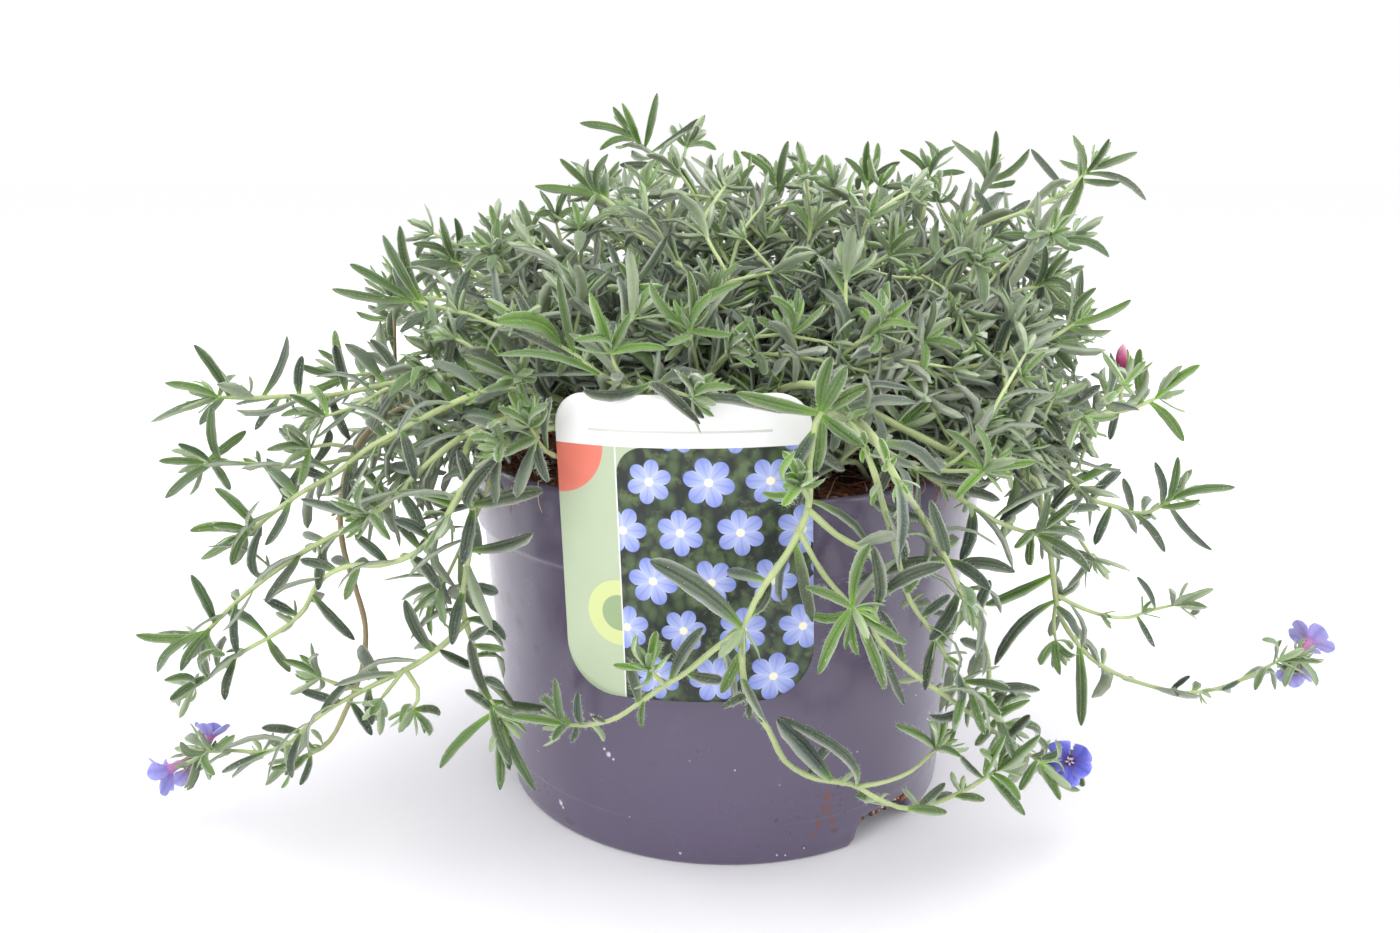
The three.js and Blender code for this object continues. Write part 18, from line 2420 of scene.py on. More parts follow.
 "l": [147,378,361,1240,28,6,0,0,-63,-21,74,203,249,190,1279,32,10,0,0,-4,81,59,258,200,413,1220,29,5,0,0,5,-32,95,312,358,274,1314,35,12,0,0,-83,28,49,367,184,256,1258,32,7,0,0,36,40,84,422,300,397,1313,36,6,0,0,-47,
-52,72,477,300,173,1350,29,11,0,0,-36,57,74,532,151,356,1335,30,12,0,0,45,-19,87,588,315,344,1372,28,8,0,0,-83,-6,56,642,178,248,1391,28,12,0,0,-4,85,52,698,182,423,1328,27,7,0,0,-42,-28,86,752,254,295,1465,33,11,12,0,
-91,36,22,807,96,302,1346,32,6,31,0,-6,55,83,863,158,403,1419,23,7,51,0,-85,-52,9,917,135,307,1425,23,9,71,0,-54,83,-13,973,103,366,1393,27,11,90,0,10,-35,93]},
{"n": "shoot_left_top", "r": [75, 50], "o": 0, "k": 1, "f": 1, "p": [[-256,-283,1348],[-255,-308,1393],[-250,-337,1478],[-254,-384,1504]],
 "l": [160,-338,-429,1435,31,13,0,0,56,7,82,240,-252,-223,1523,30,4,0,0,3,-88,47,320,-192,-389,1440,29,12,0,0,-48,16,86,400,-344,-345,1521,31,9,0,0,79,-18,58,480,-169,-260,1533,35,6,0,0,-36,-65,67,560,-260,-461,1490,33,
7,0,0,10,25,96,640,-319,-262,1607,27,9,0,0,26,-79,56,720,-153,-404,1502,28,7,0,0,-47,-58,67,800,-340,-462,1523,29,7,29,0,76,-52,40,880,-229,-411,1589,27,11,57,0,-33,-88,-35,960,-244,-460,1486,25,4,86,0,-33,-21,92]},
{"n": "shoot_top_front", "r": [75, 50], "o": 0, "k": 1, "f": 1, "p": [[155,-153,1179],[206,-194,1186],[290,-236,1215],[337,-300,1245]],
 "l": [154,279,-164,1263,33,12,0,0,38,-85,-38,289,215,-289,1316,33,10,0,0,91,-27,-32,357,310,-129,1193,27,12,0,0,54,-81,24,425,250,-369,1149,31,7,0,0,91,1,41,492,298,-206,1317,28,12,0,0,80,-50,-32,560,411,-231,1155,30,
11,0,0,24,-53,82,628,261,-363,1299,27,5,0,0,99,-11,7,695,388,-220,1282,27,4,0,0,23,-97,-2,763,327,-389,1143,32,11,15,0,60,-34,73,831,309,-306,1357,26,8,40,0,64,-74,-20,898,431,-332,1247,30,10,64,0,-42,-76,50,966,335,
-388,1275,25,8,88,0,98,8,16]},
{"n": "shoot_right_fan", "r": [75, 50], "o": 0, "k": 1, "f": 1, "p": [[379,-197,1214],[364,-271,1197],[338,-356,1213],[279,-456,1091]],
 "l": [147,265,-271,1168,34,6,0,0,40,-91,-14,203,405,-312,1283,33,7,0,0,-31,-78,-54,258,381,-312,1102,28,10,0,0,-34,-82,45,312,249,-361,1272,35,13,0,0,33,-80,-50,367,474,-387,1256,31,9,0,0,-71,-70,6,422,258,-393,1174,28,
8,0,0,36,-57,74,477,345,-320,1378,31,8,0,0,-23,-97,-9,532,405,-422,1176,35,8,0,0,-60,-53,60,588,216,-355,1240,34,10,0,0,15,-99,-5,642,387,-436,1278,35,11,0,0,-55,-66,-52,698,307,-389,1074,27,6,0,0,-34,-91,24,752,215,
-461,1192,28,6,12,0,22,-30,-93,807,348,-468,1114,29,3,31,0,-89,-3,-46,863,228,-394,1065,28,5,51,0,16,-92,-36,917,267,-504,1128,28,10,71,0,-17,2,-98]},
{"n": "shoot_top_right_2", "r": [75, 50], "o": 0, "k": 1, "f": 1, "p": [[402,249,1278],[439,214,1357],[476,140,1495],[496,106,1573]],
 "l": [146,435,292,1429,28,5,0,0,46,-83,32,198,530,157,1326,29,11,0,0,-8,-3,100,249,364,193,1423,29,4,0,0,82,-26,50,301,527,255,1410,34,9,0,0,-17,-73,67,353,439,92,1426,34,10,0,0,45,41,79,405,421,262,1504,34,10,0,0,39,
-79,48,456,568,104,1477,30,13,0,0,-57,-8,82,508,352,109,1504,33,12,0,0,66,-29,70,560,536,194,1575,28,6,0,0,-21,-91,35,612,501,35,1500,29,10,0,0,7,23,97,664,409,154,1624,31,8,0,0,66,-64,40,715,582,129,1560,35,6,0,0,-40,
-50,77,767,424,3,1577,32,13,17,0,55,10,83,819,496,174,1661,26,7,35,0,25,-90,35,871,558,55,1580,25,11,54,0,-36,11,93,922,452,87,1626,28,10,72,0,89,-21,42,974,541,110,1648,22,7,91,0,-46,-84,28]},
{"n": "shoot_back_9", "r": [75, 50], "o": 0, "k": 1, "f": 1, "p": [[-146,383,1224],[-101,379,1305],[-48,327,1460],[103,290,1496]],
 "l": [143,-146,298,1369,31,9,0,0,75,46,48,189,-65,488,1378,35,7,0,0,39,-76,51,236,-38,291,1297,29,10,0,0,18,36,92,282,-163,405,1398,33,12,0,0,83,-28,48,328,7,379,1370,33,7,0,0,-50,-32,81,375,-159,280,1445,34,11,0,0,78,
23,58,421,-36,437,1450,35,10,0,0,-8,-82,57,467,-47,264,1415,28,10,0,0,-6,42,90,514,-176,387,1496,27,7,0,0,57,-46,68,560,33,364,1474,26,9,0,0,-32,-54,77,606,-64,229,1484,33,8,0,0,56,33,76,653,-46,377,1600,28,6,0,0,77,-61,
17,699,71,321,1420,32,9,0,0,37,-33,87,745,-16,219,1557,32,8,9,0,99,9,6,792,102,363,1531,33,13,26,0,51,-84,-17,838,108,230,1428,25,12,42,0,71,32,62,884,123,278,1562,28,8,59,0,69,-5,-73,931,177,324,1474,28,8,75,0,28,-84,
46,977,147,239,1512,23,12,92,0,71,71,-6]},
{"n": "shoot_top_mid", "r": [75, 50], "o": 0, "k": 1, "f": 1, "p": [[147,161,1601],[117,248,1593],[90,370,1602],[45,477,1503]],
 "l": [146,40,240,1642,30,7,0,0,18,87,-45,198,132,289,1507,35,7,0,0,-50,65,57,249,145,294,1695,30,5,0,0,-43,78,-46,301,-20,255,1556,30,3,0,0,10,99,9,353,219,340,1571,27,7,0,0,-61,77,17,405,54,288,1717,32,9,0,0,-5,99,-15,
456,50,401,1508,35,3,0,0,6,66,75,508,174,377,1681,35,4,0,0,-57,80,-17,560,-10,391,1645,28,13,0,0,44,89,-14,612,132,448,1540,31,7,0,0,-67,57,47,664,73,458,1711,28,11,0,0,-25,73,-64,715,-19,401,1486,32,12,0,0,20,98,-6,767,
164,506,1546,27,11,17,0,-70,38,-60,819,-47,493,1568,33,12,35,0,24,43,-87,871,80,426,1417,27,6,54,0,-47,87,-13,922,48,532,1510,29,7,72,0,-36,-25,-90,974,-31,493,1458,23,4,91,0,50,76,-42]},
{"n": "shoot_front_star_2", "r": [75, 50], "o": 0, "k": 1, "f": 1, "p": [[137,-466,1140],[224,-442,1174],[337,-383,1257],[456,-276,1239]],
 "l": [143,213,-533,1267,34,8,0,0,89,45,-1,189,209,-313,1183,29,4,0,0,94,-21,28,236,314,-489,1159,34,11,0,0,25,76,60,282,211,-428,1309,35,13,0,0,97,25,-5,328,290,-352,1138,27,5,0,0,60,-14,79,375,310,-505,1254,35,12,0,0,
49,82,28,421,214,-315,1306,29,8,0,0,94,-2,34,467,422,-406,1159,33,4,0,0,26,33,91,514,285,-455,1332,35,11,0,0,78,59,20,560,315,-291,1247,32,12,0,0,78,-16,61,606,471,-459,1268,33,11,0,0,28,84,46,653,346,-304,1399,36,5,0,0,
90,33,-28,699,412,-300,1201,35,7,0,0,55,16,82,745,457,-372,1317,29,9,9,0,35,85,-40,792,366,-217,1278,26,11,26,0,95,15,-27,838,481,-338,1180,25,7,42,0,32,91,27,884,475,-262,1300,27,11,59,0,36,39,-84,931,449,-224,1200,23,
12,75,0,94,-2,35,977,518,-270,1241,23,5,92,0,-19,94,-30]},
{"n": "shoot_right_level", "r": [75, 50], "o": 0, "k": 1, "f": 1, "p": [[689,-420,1319],[730,-432,1278],[773,-443,1238],[792,-512,1090]],
 "l": [214,679,-412,1186,30,10,0,0,89,-29,-35,340,837,-311,1224,31,11,0,0,48,-67,-57,529,782,-368,1149,32,7,0,0,87,-48,-8,717,721,-406,1111,35,13,0,0,48,-70,-53,780,774,-582,1170,25,6,21,0,19,19,-96,843,843,-480,1092,25,
11,44,0,-63,-62,-46,906,746,-520,1065,28,4,66,0,87,-27,-41,969,828,-572,1061,24,7,89,0,-43,31,-85]},
{"n": "shoot_back_2", "r": [75, 50], "o": 0, "k": 1, "f": 1, "p": [[-240,440,1144],[-272,418,1234],[-322,384,1375],[-351,218,1480]],
 "l": [142,-362,320,1250,28,8,0,0,20,37,91,186,-291,503,1310,26,4,0,0,-23,-85,47,230,-195,320,1280,30,5,0,0,-64,15,75,274,-390,413,1284,29,10,0,0,48,-26,84,318,-189,484,1367,32,10,0,0,-65,-46,60,362,-329,319,1317,29,11,
0,0,-4,61,79,406,-322,501,1327,27,13,0,0,-17,-63,75,450,-229,351,1359,33,13,0,0,-68,22,70,494,-451,377,1334,34,6,0,0,21,0,98,538,-295,492,1465,30,11,0,0,-50,-74,46,582,-284,303,1410,36,9,0,0,-61,34,72,626,-479,367,1416,
36,9,0,0,36,-44,82,670,-283,395,1536,27,5,0,0,-48,-86,18,714,-297,201,1353,27,7,0,0,-34,-27,90,758,-433,335,1489,34,6,14,0,32,-91,25,802,-251,253,1514,29,5,29,0,-71,-70,9,846,-384,209,1428,27,13,45,0,38,-24,89,890,-361,
245,1530,26,6,61,0,5,-93,-35,934,-314,151,1494,22,12,76,0,-87,-11,47,978,-398,176,1509,26,5,92,0,79,-56,25]},
{"n": "shoot_top_front", "r": [75, 50], "o": 0, "k": 1, "f": 1, "p": [[207,-193,1136],[227,-149,1157],[221,-55,1227],[217,93,1319]],
 "l": [146,324,-195,1186,29,8,0,0,11,98,15,198,130,-85,1264,30,10,0,0,74,67,8,249,290,-59,1113,28,9,0,0,-7,36,93,301,279,-174,1279,26,5,0,0,-2,99,15,353,132,-87,1171,32,5,0,0,47,65,59,405,360,-46,1175,26,9,0,0,-44,62,65,
456,185,-145,1302,29,11,0,0,9,97,22,508,174,12,1152,35,9,0,0,17,36,92,560,308,-24,1325,32,8,0,0,-67,74,6,612,129,-39,1285,36,6,0,0,52,80,28,664,283,57,1195,33,3,0,0,-36,43,83,715,236,-15,1390,27,6,0,0,-12,98,-13,767,139,
71,1247,27,6,17,0,49,52,70,819,301,85,1320,29,11,35,0,-75,59,30,871,176,71,1369,27,10,54,0,44,88,-16,922,217,140,1310,25,10,72,0,-2,-15,99,974,238,126,1376,24,13,91,0,-51,78,-37]},
{"n": "shoot_top_mid", "r": [75, 50], "o": 0, "k": 1, "f": 1, "p": [[77,175,1209],[86,151,1319],[104,143,1500],[81,108,1611]],
 "l": [142,126,211,1341,33,6,0,0,-30,-76,57,186,109,42,1310,30,3,0,0,-6,34,94,230,4,198,1352,35,10,0,0,47,-44,76,274,218,185,1369,31,11,0,0,-40,-30,86,318,61,58,1371,35,12,0,0,26,45,85,362,9,244,1443,27,12,0,0,46,-49,74,
406,233,181,1421,36,9,0,0,-38,-15,91,450,46,31,1500,32,6,0,0,40,57,72,494,79,239,1521,31,7,0,0,32,-72,62,538,185,90,1526,35,5,0,0,-52,42,74,582,152,11,1543,34,9,0,0,-10,51,86,626,-2,200,1589,33,9,0,0,57,-37,74,670,6,130,
1573,27,4,0,0,60,-11,80,714,197,188,1631,33,4,0,0,-55,-49,68,758,53,32,1611,32,3,14,0,18,52,83,802,53,196,1649,30,5,29,0,-1,-84,55,846,155,45,1654,23,7,45,0,-79,9,61,890,17,95,1615,25,4,61,0,50,-21,84,934,100,132,1663,
22,3,76,0,-58,-77,29,978,74,57,1657,24,5,92,0,-28,70,66]},
{"n": "shoot_top_left_2", "r": [75, 50], "o": 0, "k": 1, "f": 1, "p": [[-190,-128,1297],[-227,-138,1290],[-282,-132,1294],[-372,-118,1207]],
 "l": [157,-298,-123,1353,30,6,0,0,-52,-47,-71,230,-258,-273,1262,33,9,0,0,-95,32,-5,303,-304,3,1236,30,12,0,0,-88,-48,9,377,-307,-172,1419,35,10,0,0,-87,22,-45,450,-405,-166,1252,34,12,0,0,-30,36,88,523,-298,-47,1366,
30,5,0,0,-93,-36,-12,597,-390,-221,1337,31,10,0,0,-61,71,-36,670,-290,-73,1191,35,5,0,0,-98,-19,-4,743,-421,-93,1310,27,8,8,0,-26,-6,-96,817,-346,-186,1191,32,7,35,0,-68,66,-32,890,-386,-53,1185,24,6,61,0,-53,-70,-47,
963,-434,-139,1205,27,7,87,0,3,44,-89]},
{"n": "shoot_right_bud", "r": [75, 50], "o": 0, "k": 1, "f": 1, "p": [[386,-403,1180],[430,-392,1186],[482,-359,1196],[574,-283,1161]],
 "l": [154,524,-473,1142,30,3,0,0,58,69,43,222,457,-371,1295,33,11,0,0,91,15,-39,289,506,-276,1093,34,8,0,0,80,-10,59,357,571,-465,1261,34,5,0,0,50,86,-6,425,449,-262,1286,33,9,0,0,100,0,-7,492,557,-354,1141,31,12,0,0,
28,50,82,560,556,-365,1339,34,3,0,0,61,66,-44,628,505,-222,1167,35,6,0,0,97,-17,17,695,649,-378,1155,31,8,0,0,14,99,-4,763,539,-232,1293,34,7,15,0,72,36,-60,831,552,-268,1060,30,9,40,0,80,45,39,966,591,-198,1159,25,6,88,
0,86,-28,-43]},
{"n": "shoot_top_front", "r": [75, 50], "o": 0, "k": 1, "f": 1, "p": [[172,-166,1168],[188,-120,1203],[217,-52,1350],[142,151,1438]],
 "l": [142,307,-146,1247,29,11,0,0,-11,98,19,186,120,-81,1261,30,3,0,0,76,64,9,230,280,-4,1153,35,8,0,0,-15,33,93,274,212,-165,1315,34,7,0,0,15,96,24,318,119,-16,1233,30,11,0,0,58,11,81,362,291,-107,1282,31,5,0,0,-51,53,
68,406,108,-116,1345,35,13,0,0,73,38,57,450,274,0,1291,27,3,0,0,-11,-31,95,494,250,-153,1376,33,10,0,0,1,88,47,538,121,-14,1396,26,5,0,0,77,7,64,582,335,11,1342,34,5,0,0,-33,15,93,626,222,-118,1449,31,12,0,0,0,91,40,670,
92,44,1329,29,10,0,0,27,55,79,714,306,34,1408,33,8,0,0,-64,66,40,758,111,16,1492,28,6,14,0,12,99,-9,802,167,116,1364,33,5,29,0,-22,20,96,846,209,121,1512,32,13,45,0,-64,70,-30,890,87,139,1438,30,4,61,0,61,77,17,934,162,
181,1435,24,10,76,0,-93,-3,38,978,125,163,1489,22,12,92,0,-13,88,-45]},
{"n": "shoot_back_6", "r": [75, 50], "o": 0, "k": 1, "f": 1, "p": [[592,678,1131],[612,694,1166],[626,714,1252],[659,708,1402]],
 "l": [149,702,646,1239,32,4,0,0,3,94,35,208,557,764,1280,29,6,0,0,95,7,30,267,714,756,1187,27,4,0,0,-27,-2,96,325,614,633,1282,32,8,0,0,35,84,42,384,539,803,1225,26,10,0,0,49,-6,87,443,747,730,1292,27,7,0,0,-63,26,73,
501,541,652,1304,35,11,0,0,50,55,67,560,667,866,1278,33,4,0,0,-2,-35,94,619,649,610,1349,32,12,0,0,8,75,66,677,606,788,1344,27,8,0,0,48,-62,63,736,717,650,1320,27,6,6,0,-21,32,93,795,577,714,1413,28,9,27,0,87,-7,48,853,
728,760,1397,28,11,48,0,-36,-46,81,912,652,648,1434,27,11,69,0,33,73,60,971,651,737,1472,26,4,90,0,60,-74,29]},
{"n": "shoot_back_12", "r": [75, 50], "o": 0, "k": 1, "f": 1, "p": [[610,-79,1280],[652,-22,1248],[685,46,1260],[743,281,1230]],
 "l": [143,598,80,1184,33,6,0,0,98,12,-18,189,751,-63,1206,30,13,0,0,1,97,-25,236,675,97,1324,28,8,0,0,52,29,-81,282,668,55,1115,29,5,0,0,66,58,48,328,769,-6,1311,36,12,0,0,11,89,-45,375,610,139,1294,28,12,0,0,94,32,-13,
421,784,48,1217,32,7,0,0,-14,70,70,467,681,2,1424,35,7,0,0,52,85,-8,514,640,161,1217,32,13,0,0,73,28,63,560,796,24,1289,28,11,0,0,-13,98,12,606,645,119,1337,27,13,0,0,68,59,-43,653,730,149,1152,28,6,0,0,11,67,73,699,755,
121,1329,35,11,0,0,-11,81,-58,745,608,167,1244,28,5,9,0,66,75,-7,792,782,181,1217,30,8,26,0,-54,82,21,838,711,242,1326,25,4,42,0,30,65,-70,884,700,267,1169,28,8,59,0,54,66,52,931,807,308,1259,24,13,75,0,-55,67,-50,977,
720,347,1248,28,7,92,0,80,28,-53]},
{"n": "shoot_right_drop", "r": [75, 50], "o": 0, "k": 1, "f": 1, "p": [[563,-397,1148],[657,-366,1149],[777,-319,1171],[891,-166,1132]],
 "l": [282,729,-409,1081,27,13,0,0,62,63,47,328,703,-358,1249,29,9,0,0,84,34,-43,375,758,-252,1116,28,4,0,0,74,-42,53,421,796,-451,1191,35,13,0,0,63,77,11,467,743,-264,1265,26,7,0,0,96,-15,-23,514,823,-328,1081,29,4,0,0,
58,23,78,560,805,-368,1252,29,11,0,0,69,64,-35,606,755,-223,1172,33,5,0,0,100,0,9,653,910,-376,1106,30,10,0,0,43,89,18,699,808,-256,1269,27,8,0,0,69,57,-44,745,806,-187,1049,26,5,9,0,80,44,40,792,926,-250,1184,33,6,26,0,
-7,89,-45,838,823,-123,1183,24,5,42,0,84,20,-51,884,919,-181,1073,30,8,59,0,8,84,54,931,912,-160,1184,24,13,75,0,20,60,-77,977,884,-98,1106,28,5,92,0,99,4,14]},
{"n": "shoot_top_fan", "r": [75, 50], "o": 0, "k": 1, "f": 1, "p": [[-21,-326,1236],[-27,-349,1262],[-48,-374,1307],[-89,-400,1344]],
 "l": [164,3,-319,1381,29,9,0,0,-30,-93,19,252,-9,-476,1252,31,6,0,0,-35,-6,93,340,-119,-326,1358,30,12,0,0,23,-87,44,428,64,-410,1372,35,5,0,0,-76,-32,57,516,-150,-444,1337,27,11,0,0,41,-1,91,604,-32,-315,1396,33,6,0,0,
-54,-71,45,692,-48,-486,1320,27,5,0,0,-68,6,73,780,-180,-344,1366,30,12,21,0,-8,-85,52,868,-83,-444,1451,24,6,53,0,-98,-15,-16,956,-169,-460,1352,26,7,84,0,-1,20,98]},
{"n": "shoot_centre_right", "r": [75, 50], "o": 0, "k": 1, "f": 1, "p": [[138,-289,1267],[179,-327,1233],[243,-373,1228],[340,-377,1128]],
 "l": [151,296,-252,1209,28,5,0,0,16,-84,-52,214,108,-384,1171,29,5,0,0,88,-36,-32,277,248,-363,1320,31,8,0,0,49,-50,-72,340,275,-338,1147,35,7,0,0,29,-85,43,403,152,-438,1275,35,4,0,0,92,-38,-7,466,314,-309,1312,31,11,
0,0,41,-90,-15,529,279,-463,1139,31,3,0,0,70,-19,69,591,271,-438,1336,33,12,0,0,79,-28,-55,654,299,-279,1174,31,11,0,0,69,-64,-34,717,301,-501,1133,27,6,0,0,73,54,-42,780,426,-335,1191,27,8,21,0,3,-32,-95,843,303,-364,
1086,26,9,44,0,98,-20,8,906,406,-426,1120,24,11,66,0,-2,60,-80,969,389,-315,1100,21,11,89,0,33,-70,-64]},
{"n": "shoot_top_left", "r": [75, 50], "o": 0, "k": 1, "f": 1, "p": [[-107,168,1106],[-159,178,1178],[-240,168,1280],[-358,240,1330]],
 "l": [146,-220,277,1164,32,6,0,0,-20,-42,89,198,-67,162,1302,27,7,0,0,-89,20,41,249,-294,120,1223,31,4,0,0,14,57,81,301,-172,300,1231,34,3,0,0,-61,-43,67,353,-147,111,1277,29,9,0,0,-85,35,40,405,-285,161,1199,28,3,0,0,
2,-9,100,456,-175,230,1325,33,5,0,0,-74,-56,37,508,-232,69,1291,27,8,0,0,-52,56,65,560,-336,267,1301,28,6,0,0,-19,-62,76,612,-180,124,1403,31,7,0,0,-92,17,35,664,-363,165,1289,28,5,0,0,7,37,93,715,-273,256,1364,35,10,0,
0,-98,-22,2,767,-368,138,1366,34,4,17,0,-42,91,2,819,-380,306,1283,28,7,35,0,-52,-24,82,871,-337,249,1419,23,12,54,0,-83,42,-37,922,-435,218,1314,26,7,72,0,-5,87,49,974,-375,295,1346,23,6,91,0,-90,-42,13]},
{"n": "shoot_back_7", "r": [75, 50], "o": 0, "k": 1, "f": 1, "p": [[784,189,1119],[788,213,1157],[748,272,1256],[721,359,1402]],
 "l": [146,742,186,1255,27,12,0,0,63,72,30,198,787,328,1141,34,10,0,0,22,-2,98,249,867,207,1236,34,10,0,0,-57,69,45,301,703,200,1240,31,9,0,0,42,77,48,353,779,336,1184,30,9,0,0,-31,-20,93,405,820,203,1305,29,4,0,0,-64,
71,29,456,625,244,1205,34,4,0,0,15,50,85,508,818,331,1255,27,11,0,0,-75,3,66,560,728,193,1310,30,6,0,0,-22,86,46,612,670,395,1283,31,9,0,0,16,-23,96,664,815,292,1385,35,6,0,0,-77,56,30,715,627,302,1372,35,9,0,0,56,62,55,
767,774,402,1359,25,9,17,0,-61,-25,75,819,734,262,1430,28,9,35,0,-17,90,39,871,672,393,1376,29,11,54,0,46,-3,89,922,771,387,1462,28,4,72,0,-92,29,28,974,686,350,1450,28,5,91,0,43,85,30]},
{"n": "shoot_top_front", "r": [75, 50], "o": 0, "k": 1, "f": 1, "p": [[181,-168,1354],[244,-194,1339],[343,-213,1319],[458,-297,1132]],
 "l": [143,303,-110,1350,35,13,0,0,57,-78,-26,189,251,-268,1285,31,12,0,0,94,23,26,236,320,-217,1443,29,7,0,0,64,-29,-71,282,321,-134,1239,35,12,0,0,70,-67,24,328,305,-310,1353,32,10,0,0,84,41,-34,375,360,-137,1400,29,
11,0,0,63,-63,-46,421,370,-240,1240,29,13,0,0,71,13,69,467,330,-264,1472,27,6,0,0,95,9,-31,514,369,-68,1308,32,10,0,0,87,-48,6,560,329,-313,1298,30,9,0,0,97,21,-9,606,439,-188,1417,34,11,0,0,59,-33,-74,653,339,-172,1210,
33,3,0,0,81,-55,-19,699,388,-354,1309,27,11,0,0,57,14,-81,745,479,-190,1251,27,8,9,0,-1,-67,-74,792,311,-272,1160,27,12,26,0,81,-28,-51,838,495,-344,1231,32,12,42,0,4,6,-100,884,467,-198,1106,22,11,59,0,27,-85,-45,931,
423,-341,1136,22,12,75,0,73,25,-63,977,528,-305,1122,24,8,92,0,-32,-35,-88]},
{"n": "shoot_top_front", "r": [75, 50], "o": 0, "k": 1, "f": 1, "p": [[147,-148,1237],[174,-185,1244],[220,-241,1278],[261,-313,1198]],
 "l": [157,152,-269,1347,26,12,0,0,77,-49,-42,230,320,-178,1257,26,4,0,0,-5,-99,13,303,150,-302,1221,31,8,0,0,84,-23,49,377,194,-170,1378,31,6,0,0,56,-83,7,450,345,-261,1208,28,6,0,0,9,-51,86,523,129,-318,1356,36,11,0,0,
88,-37,29,597,310,-211,1347,31,8,0,0,18,-98,-2,670,190,-316,1126,27,9,0,0,74,-65,17,743,261,-385,1329,32,4,8,0,34,-34,-88,817,333,-253,1160,26,4,35,0,-19,-90,-39,890,221,-347,1176,28,7,61,0,91,-4,-41,963,325,-375,1177,
23,4,87,0,-44,-4,-90]},
{"n": "shoot_back_9", "r": [75, 50], "o": 0, "k": 1, "f": 1, "p": [[-123,310,1053],[-108,340,1092],[-74,395,1122],[-41,440,1174]],
 "l": [157,6,371,1104,30,10,0,0,-37,39,84,230,-149,296,1186,27,4,0,0,48,78,40,303,-105,471,1079,36,4,0,0,47,5,88,377,38,307,1179,28,11,0,0,10,95,29,450,-150,461,1199,34,8,0,0,88,48,-4,523,17,462,1051,33,6,0,0,1,52,85,
597,-40,360,1255,31,11,0,0,41,91,3,670,-132,550,1134,31,6,0,0,74,24,63,743,76,435,1201,26,6,8,0,-40,76,51,817,-100,434,1255,27,6,35,0,78,60,19,890,-10,499,1184,25,6,61,0,1,-36,93,963,5,444,1248,25,3,87,0,-6,100,-7]},
{"n": "shoot_left_top", "r": [75, 50], "o": 0, "k": 1, "f": 1, "p": [[-236,-192,1198],[-224,-208,1258],[-189,-216,1371],[-197,-179,1457]],
 "l": [151,-131,-196,1320,35,9,0,0,-59,-50,63,214,-266,-331,1277,32,9,0,0,35,21,91,277,-265,-148,1371,29,4,0,0,56,-67,48,340,-75,-205,1324,35,10,0,0,-38,-19,90,403,-243,-293,1379,31,5,0,0,68,48,56,466,-199,-104,1409,32,
12,0,0,36,-67,64,529,-87,-287,1354,33,11,0,0,-12,22,97,591,-251,-248,1450,30,5,0,0,82,24,52,654,-198,-126,1431,31,6,0,0,27,-54,80,717,-57,-165,1446,31,12,0,0,-46,16,87,780,-223,-240,1525,26,12,21,0,21,93,31,843,-226,
-125,1458,26,6,44,0,29,-35,89,906,-150,-180,1504,26,7,66,0,-76,53,38,969,-260,-173,1530,23,7,89,0,67,58,46]},
{"n": "shoot_top_mid", "r": [75, 50], "o": 0, "k": 1, "f": 1, "p": [[72,182,1188],[86,229,1192],[86,293,1201],[118,454,1104]],
 "l": [149,119,257,1350,32,10,0,0,26,89,-37,208,11,289,1135,36,13,0,0,59,75,31,267,243,288,1216,26,11,0,0,-40,92,3,325,30,304,1283,32,3,0,0,49,79,-36,384,88,385,1104,34,11,0,0,-4,52,85,443,150,268,1309,28,5,0,0,-40,91,5,
501,-36,308,1227,29,13,0,0,44,85,29,560,177,335,1161,31,4,0,0,-46,82,33,619,65,358,1323,27,5,0,0,13,83,-54,677,38,368,1082,28,10,0,0,53,80,27,736,194,395,1183,30,3,6,0,-48,63,-61,795,15,477,1180,31,3,27,0,60,42,-68,912,
157,505,1170,26,13,69,0,-10,40,-91,971,63,505,1055,27,7,90,0,83,54,-14]},
{"n": "shoot_front_star_3", "r": [75, 50], "o": 0, "k": 1, "f": 1, "p": [[260,-584,1341],[332,-593,1320],[416,-585,1334],[562,-562,1113]],
 "l": [143,338,-561,1176,32,4,0,0,93,-30,23,189,380,-666,1357,34,8,0,0,64,41,-65,236,428,-465,1338,30,10,0,0,70,-62,-35,282,369,-668,1239,31,10,0,0,91,33,24,328,432,-600,1438,35,10,0,0,76,2,-65,375,450,-509,1296,36,12,0,
0,55,-52,65,421,418,-717,1389,30,11,0,0,71,58,40,467,366,-509,1443,32,6,0,0,94,-28,18,514,480,-593,1283,32,10,0,0,48,13,87,606,446,-445,1315,30,3,0,0,91,-36,-21,653,460,-660,1262,32,10,0,0,67,70,-27,792,562,-641,1213,28,
3,26,0,0,65,-76,838,549,-488,1183,24,12,42,0,21,-61,-76,931,638,-566,1120,24,6,75,0,-37,13,-92,977,569,-516,1052,27,10,92,0,71,-66,-25]},
{"n": "shoot_right_fan", "r": [75, 50], "o": 0, "k": 1, "f": 1, "p": [[545,-255,1418],[579,-271,1407],[624,-300,1400],[656,-343,1341]],
 "l": [164,582,-351,1320,27,12,0,0,99,6,16,252,655,-313,1547,36,11,0,0,74,-34,-58,340,714,-225,1308,35,13,0,0,48,-84,26,428,586,-426,1431,27,5,0,0,100,-4,-7,516,693,-244,1489,28,10,0,0,62,-72,-31,604,636,-335,1246,34,9,
0,0,81,-53,24,692,652,-420,1451,32,8,0,0,52,-26,-81,780,726,-270,1343,27,8,21,0,8,-77,-64,868,609,-386,1285,24,11,53,0,94,-13,-31]},
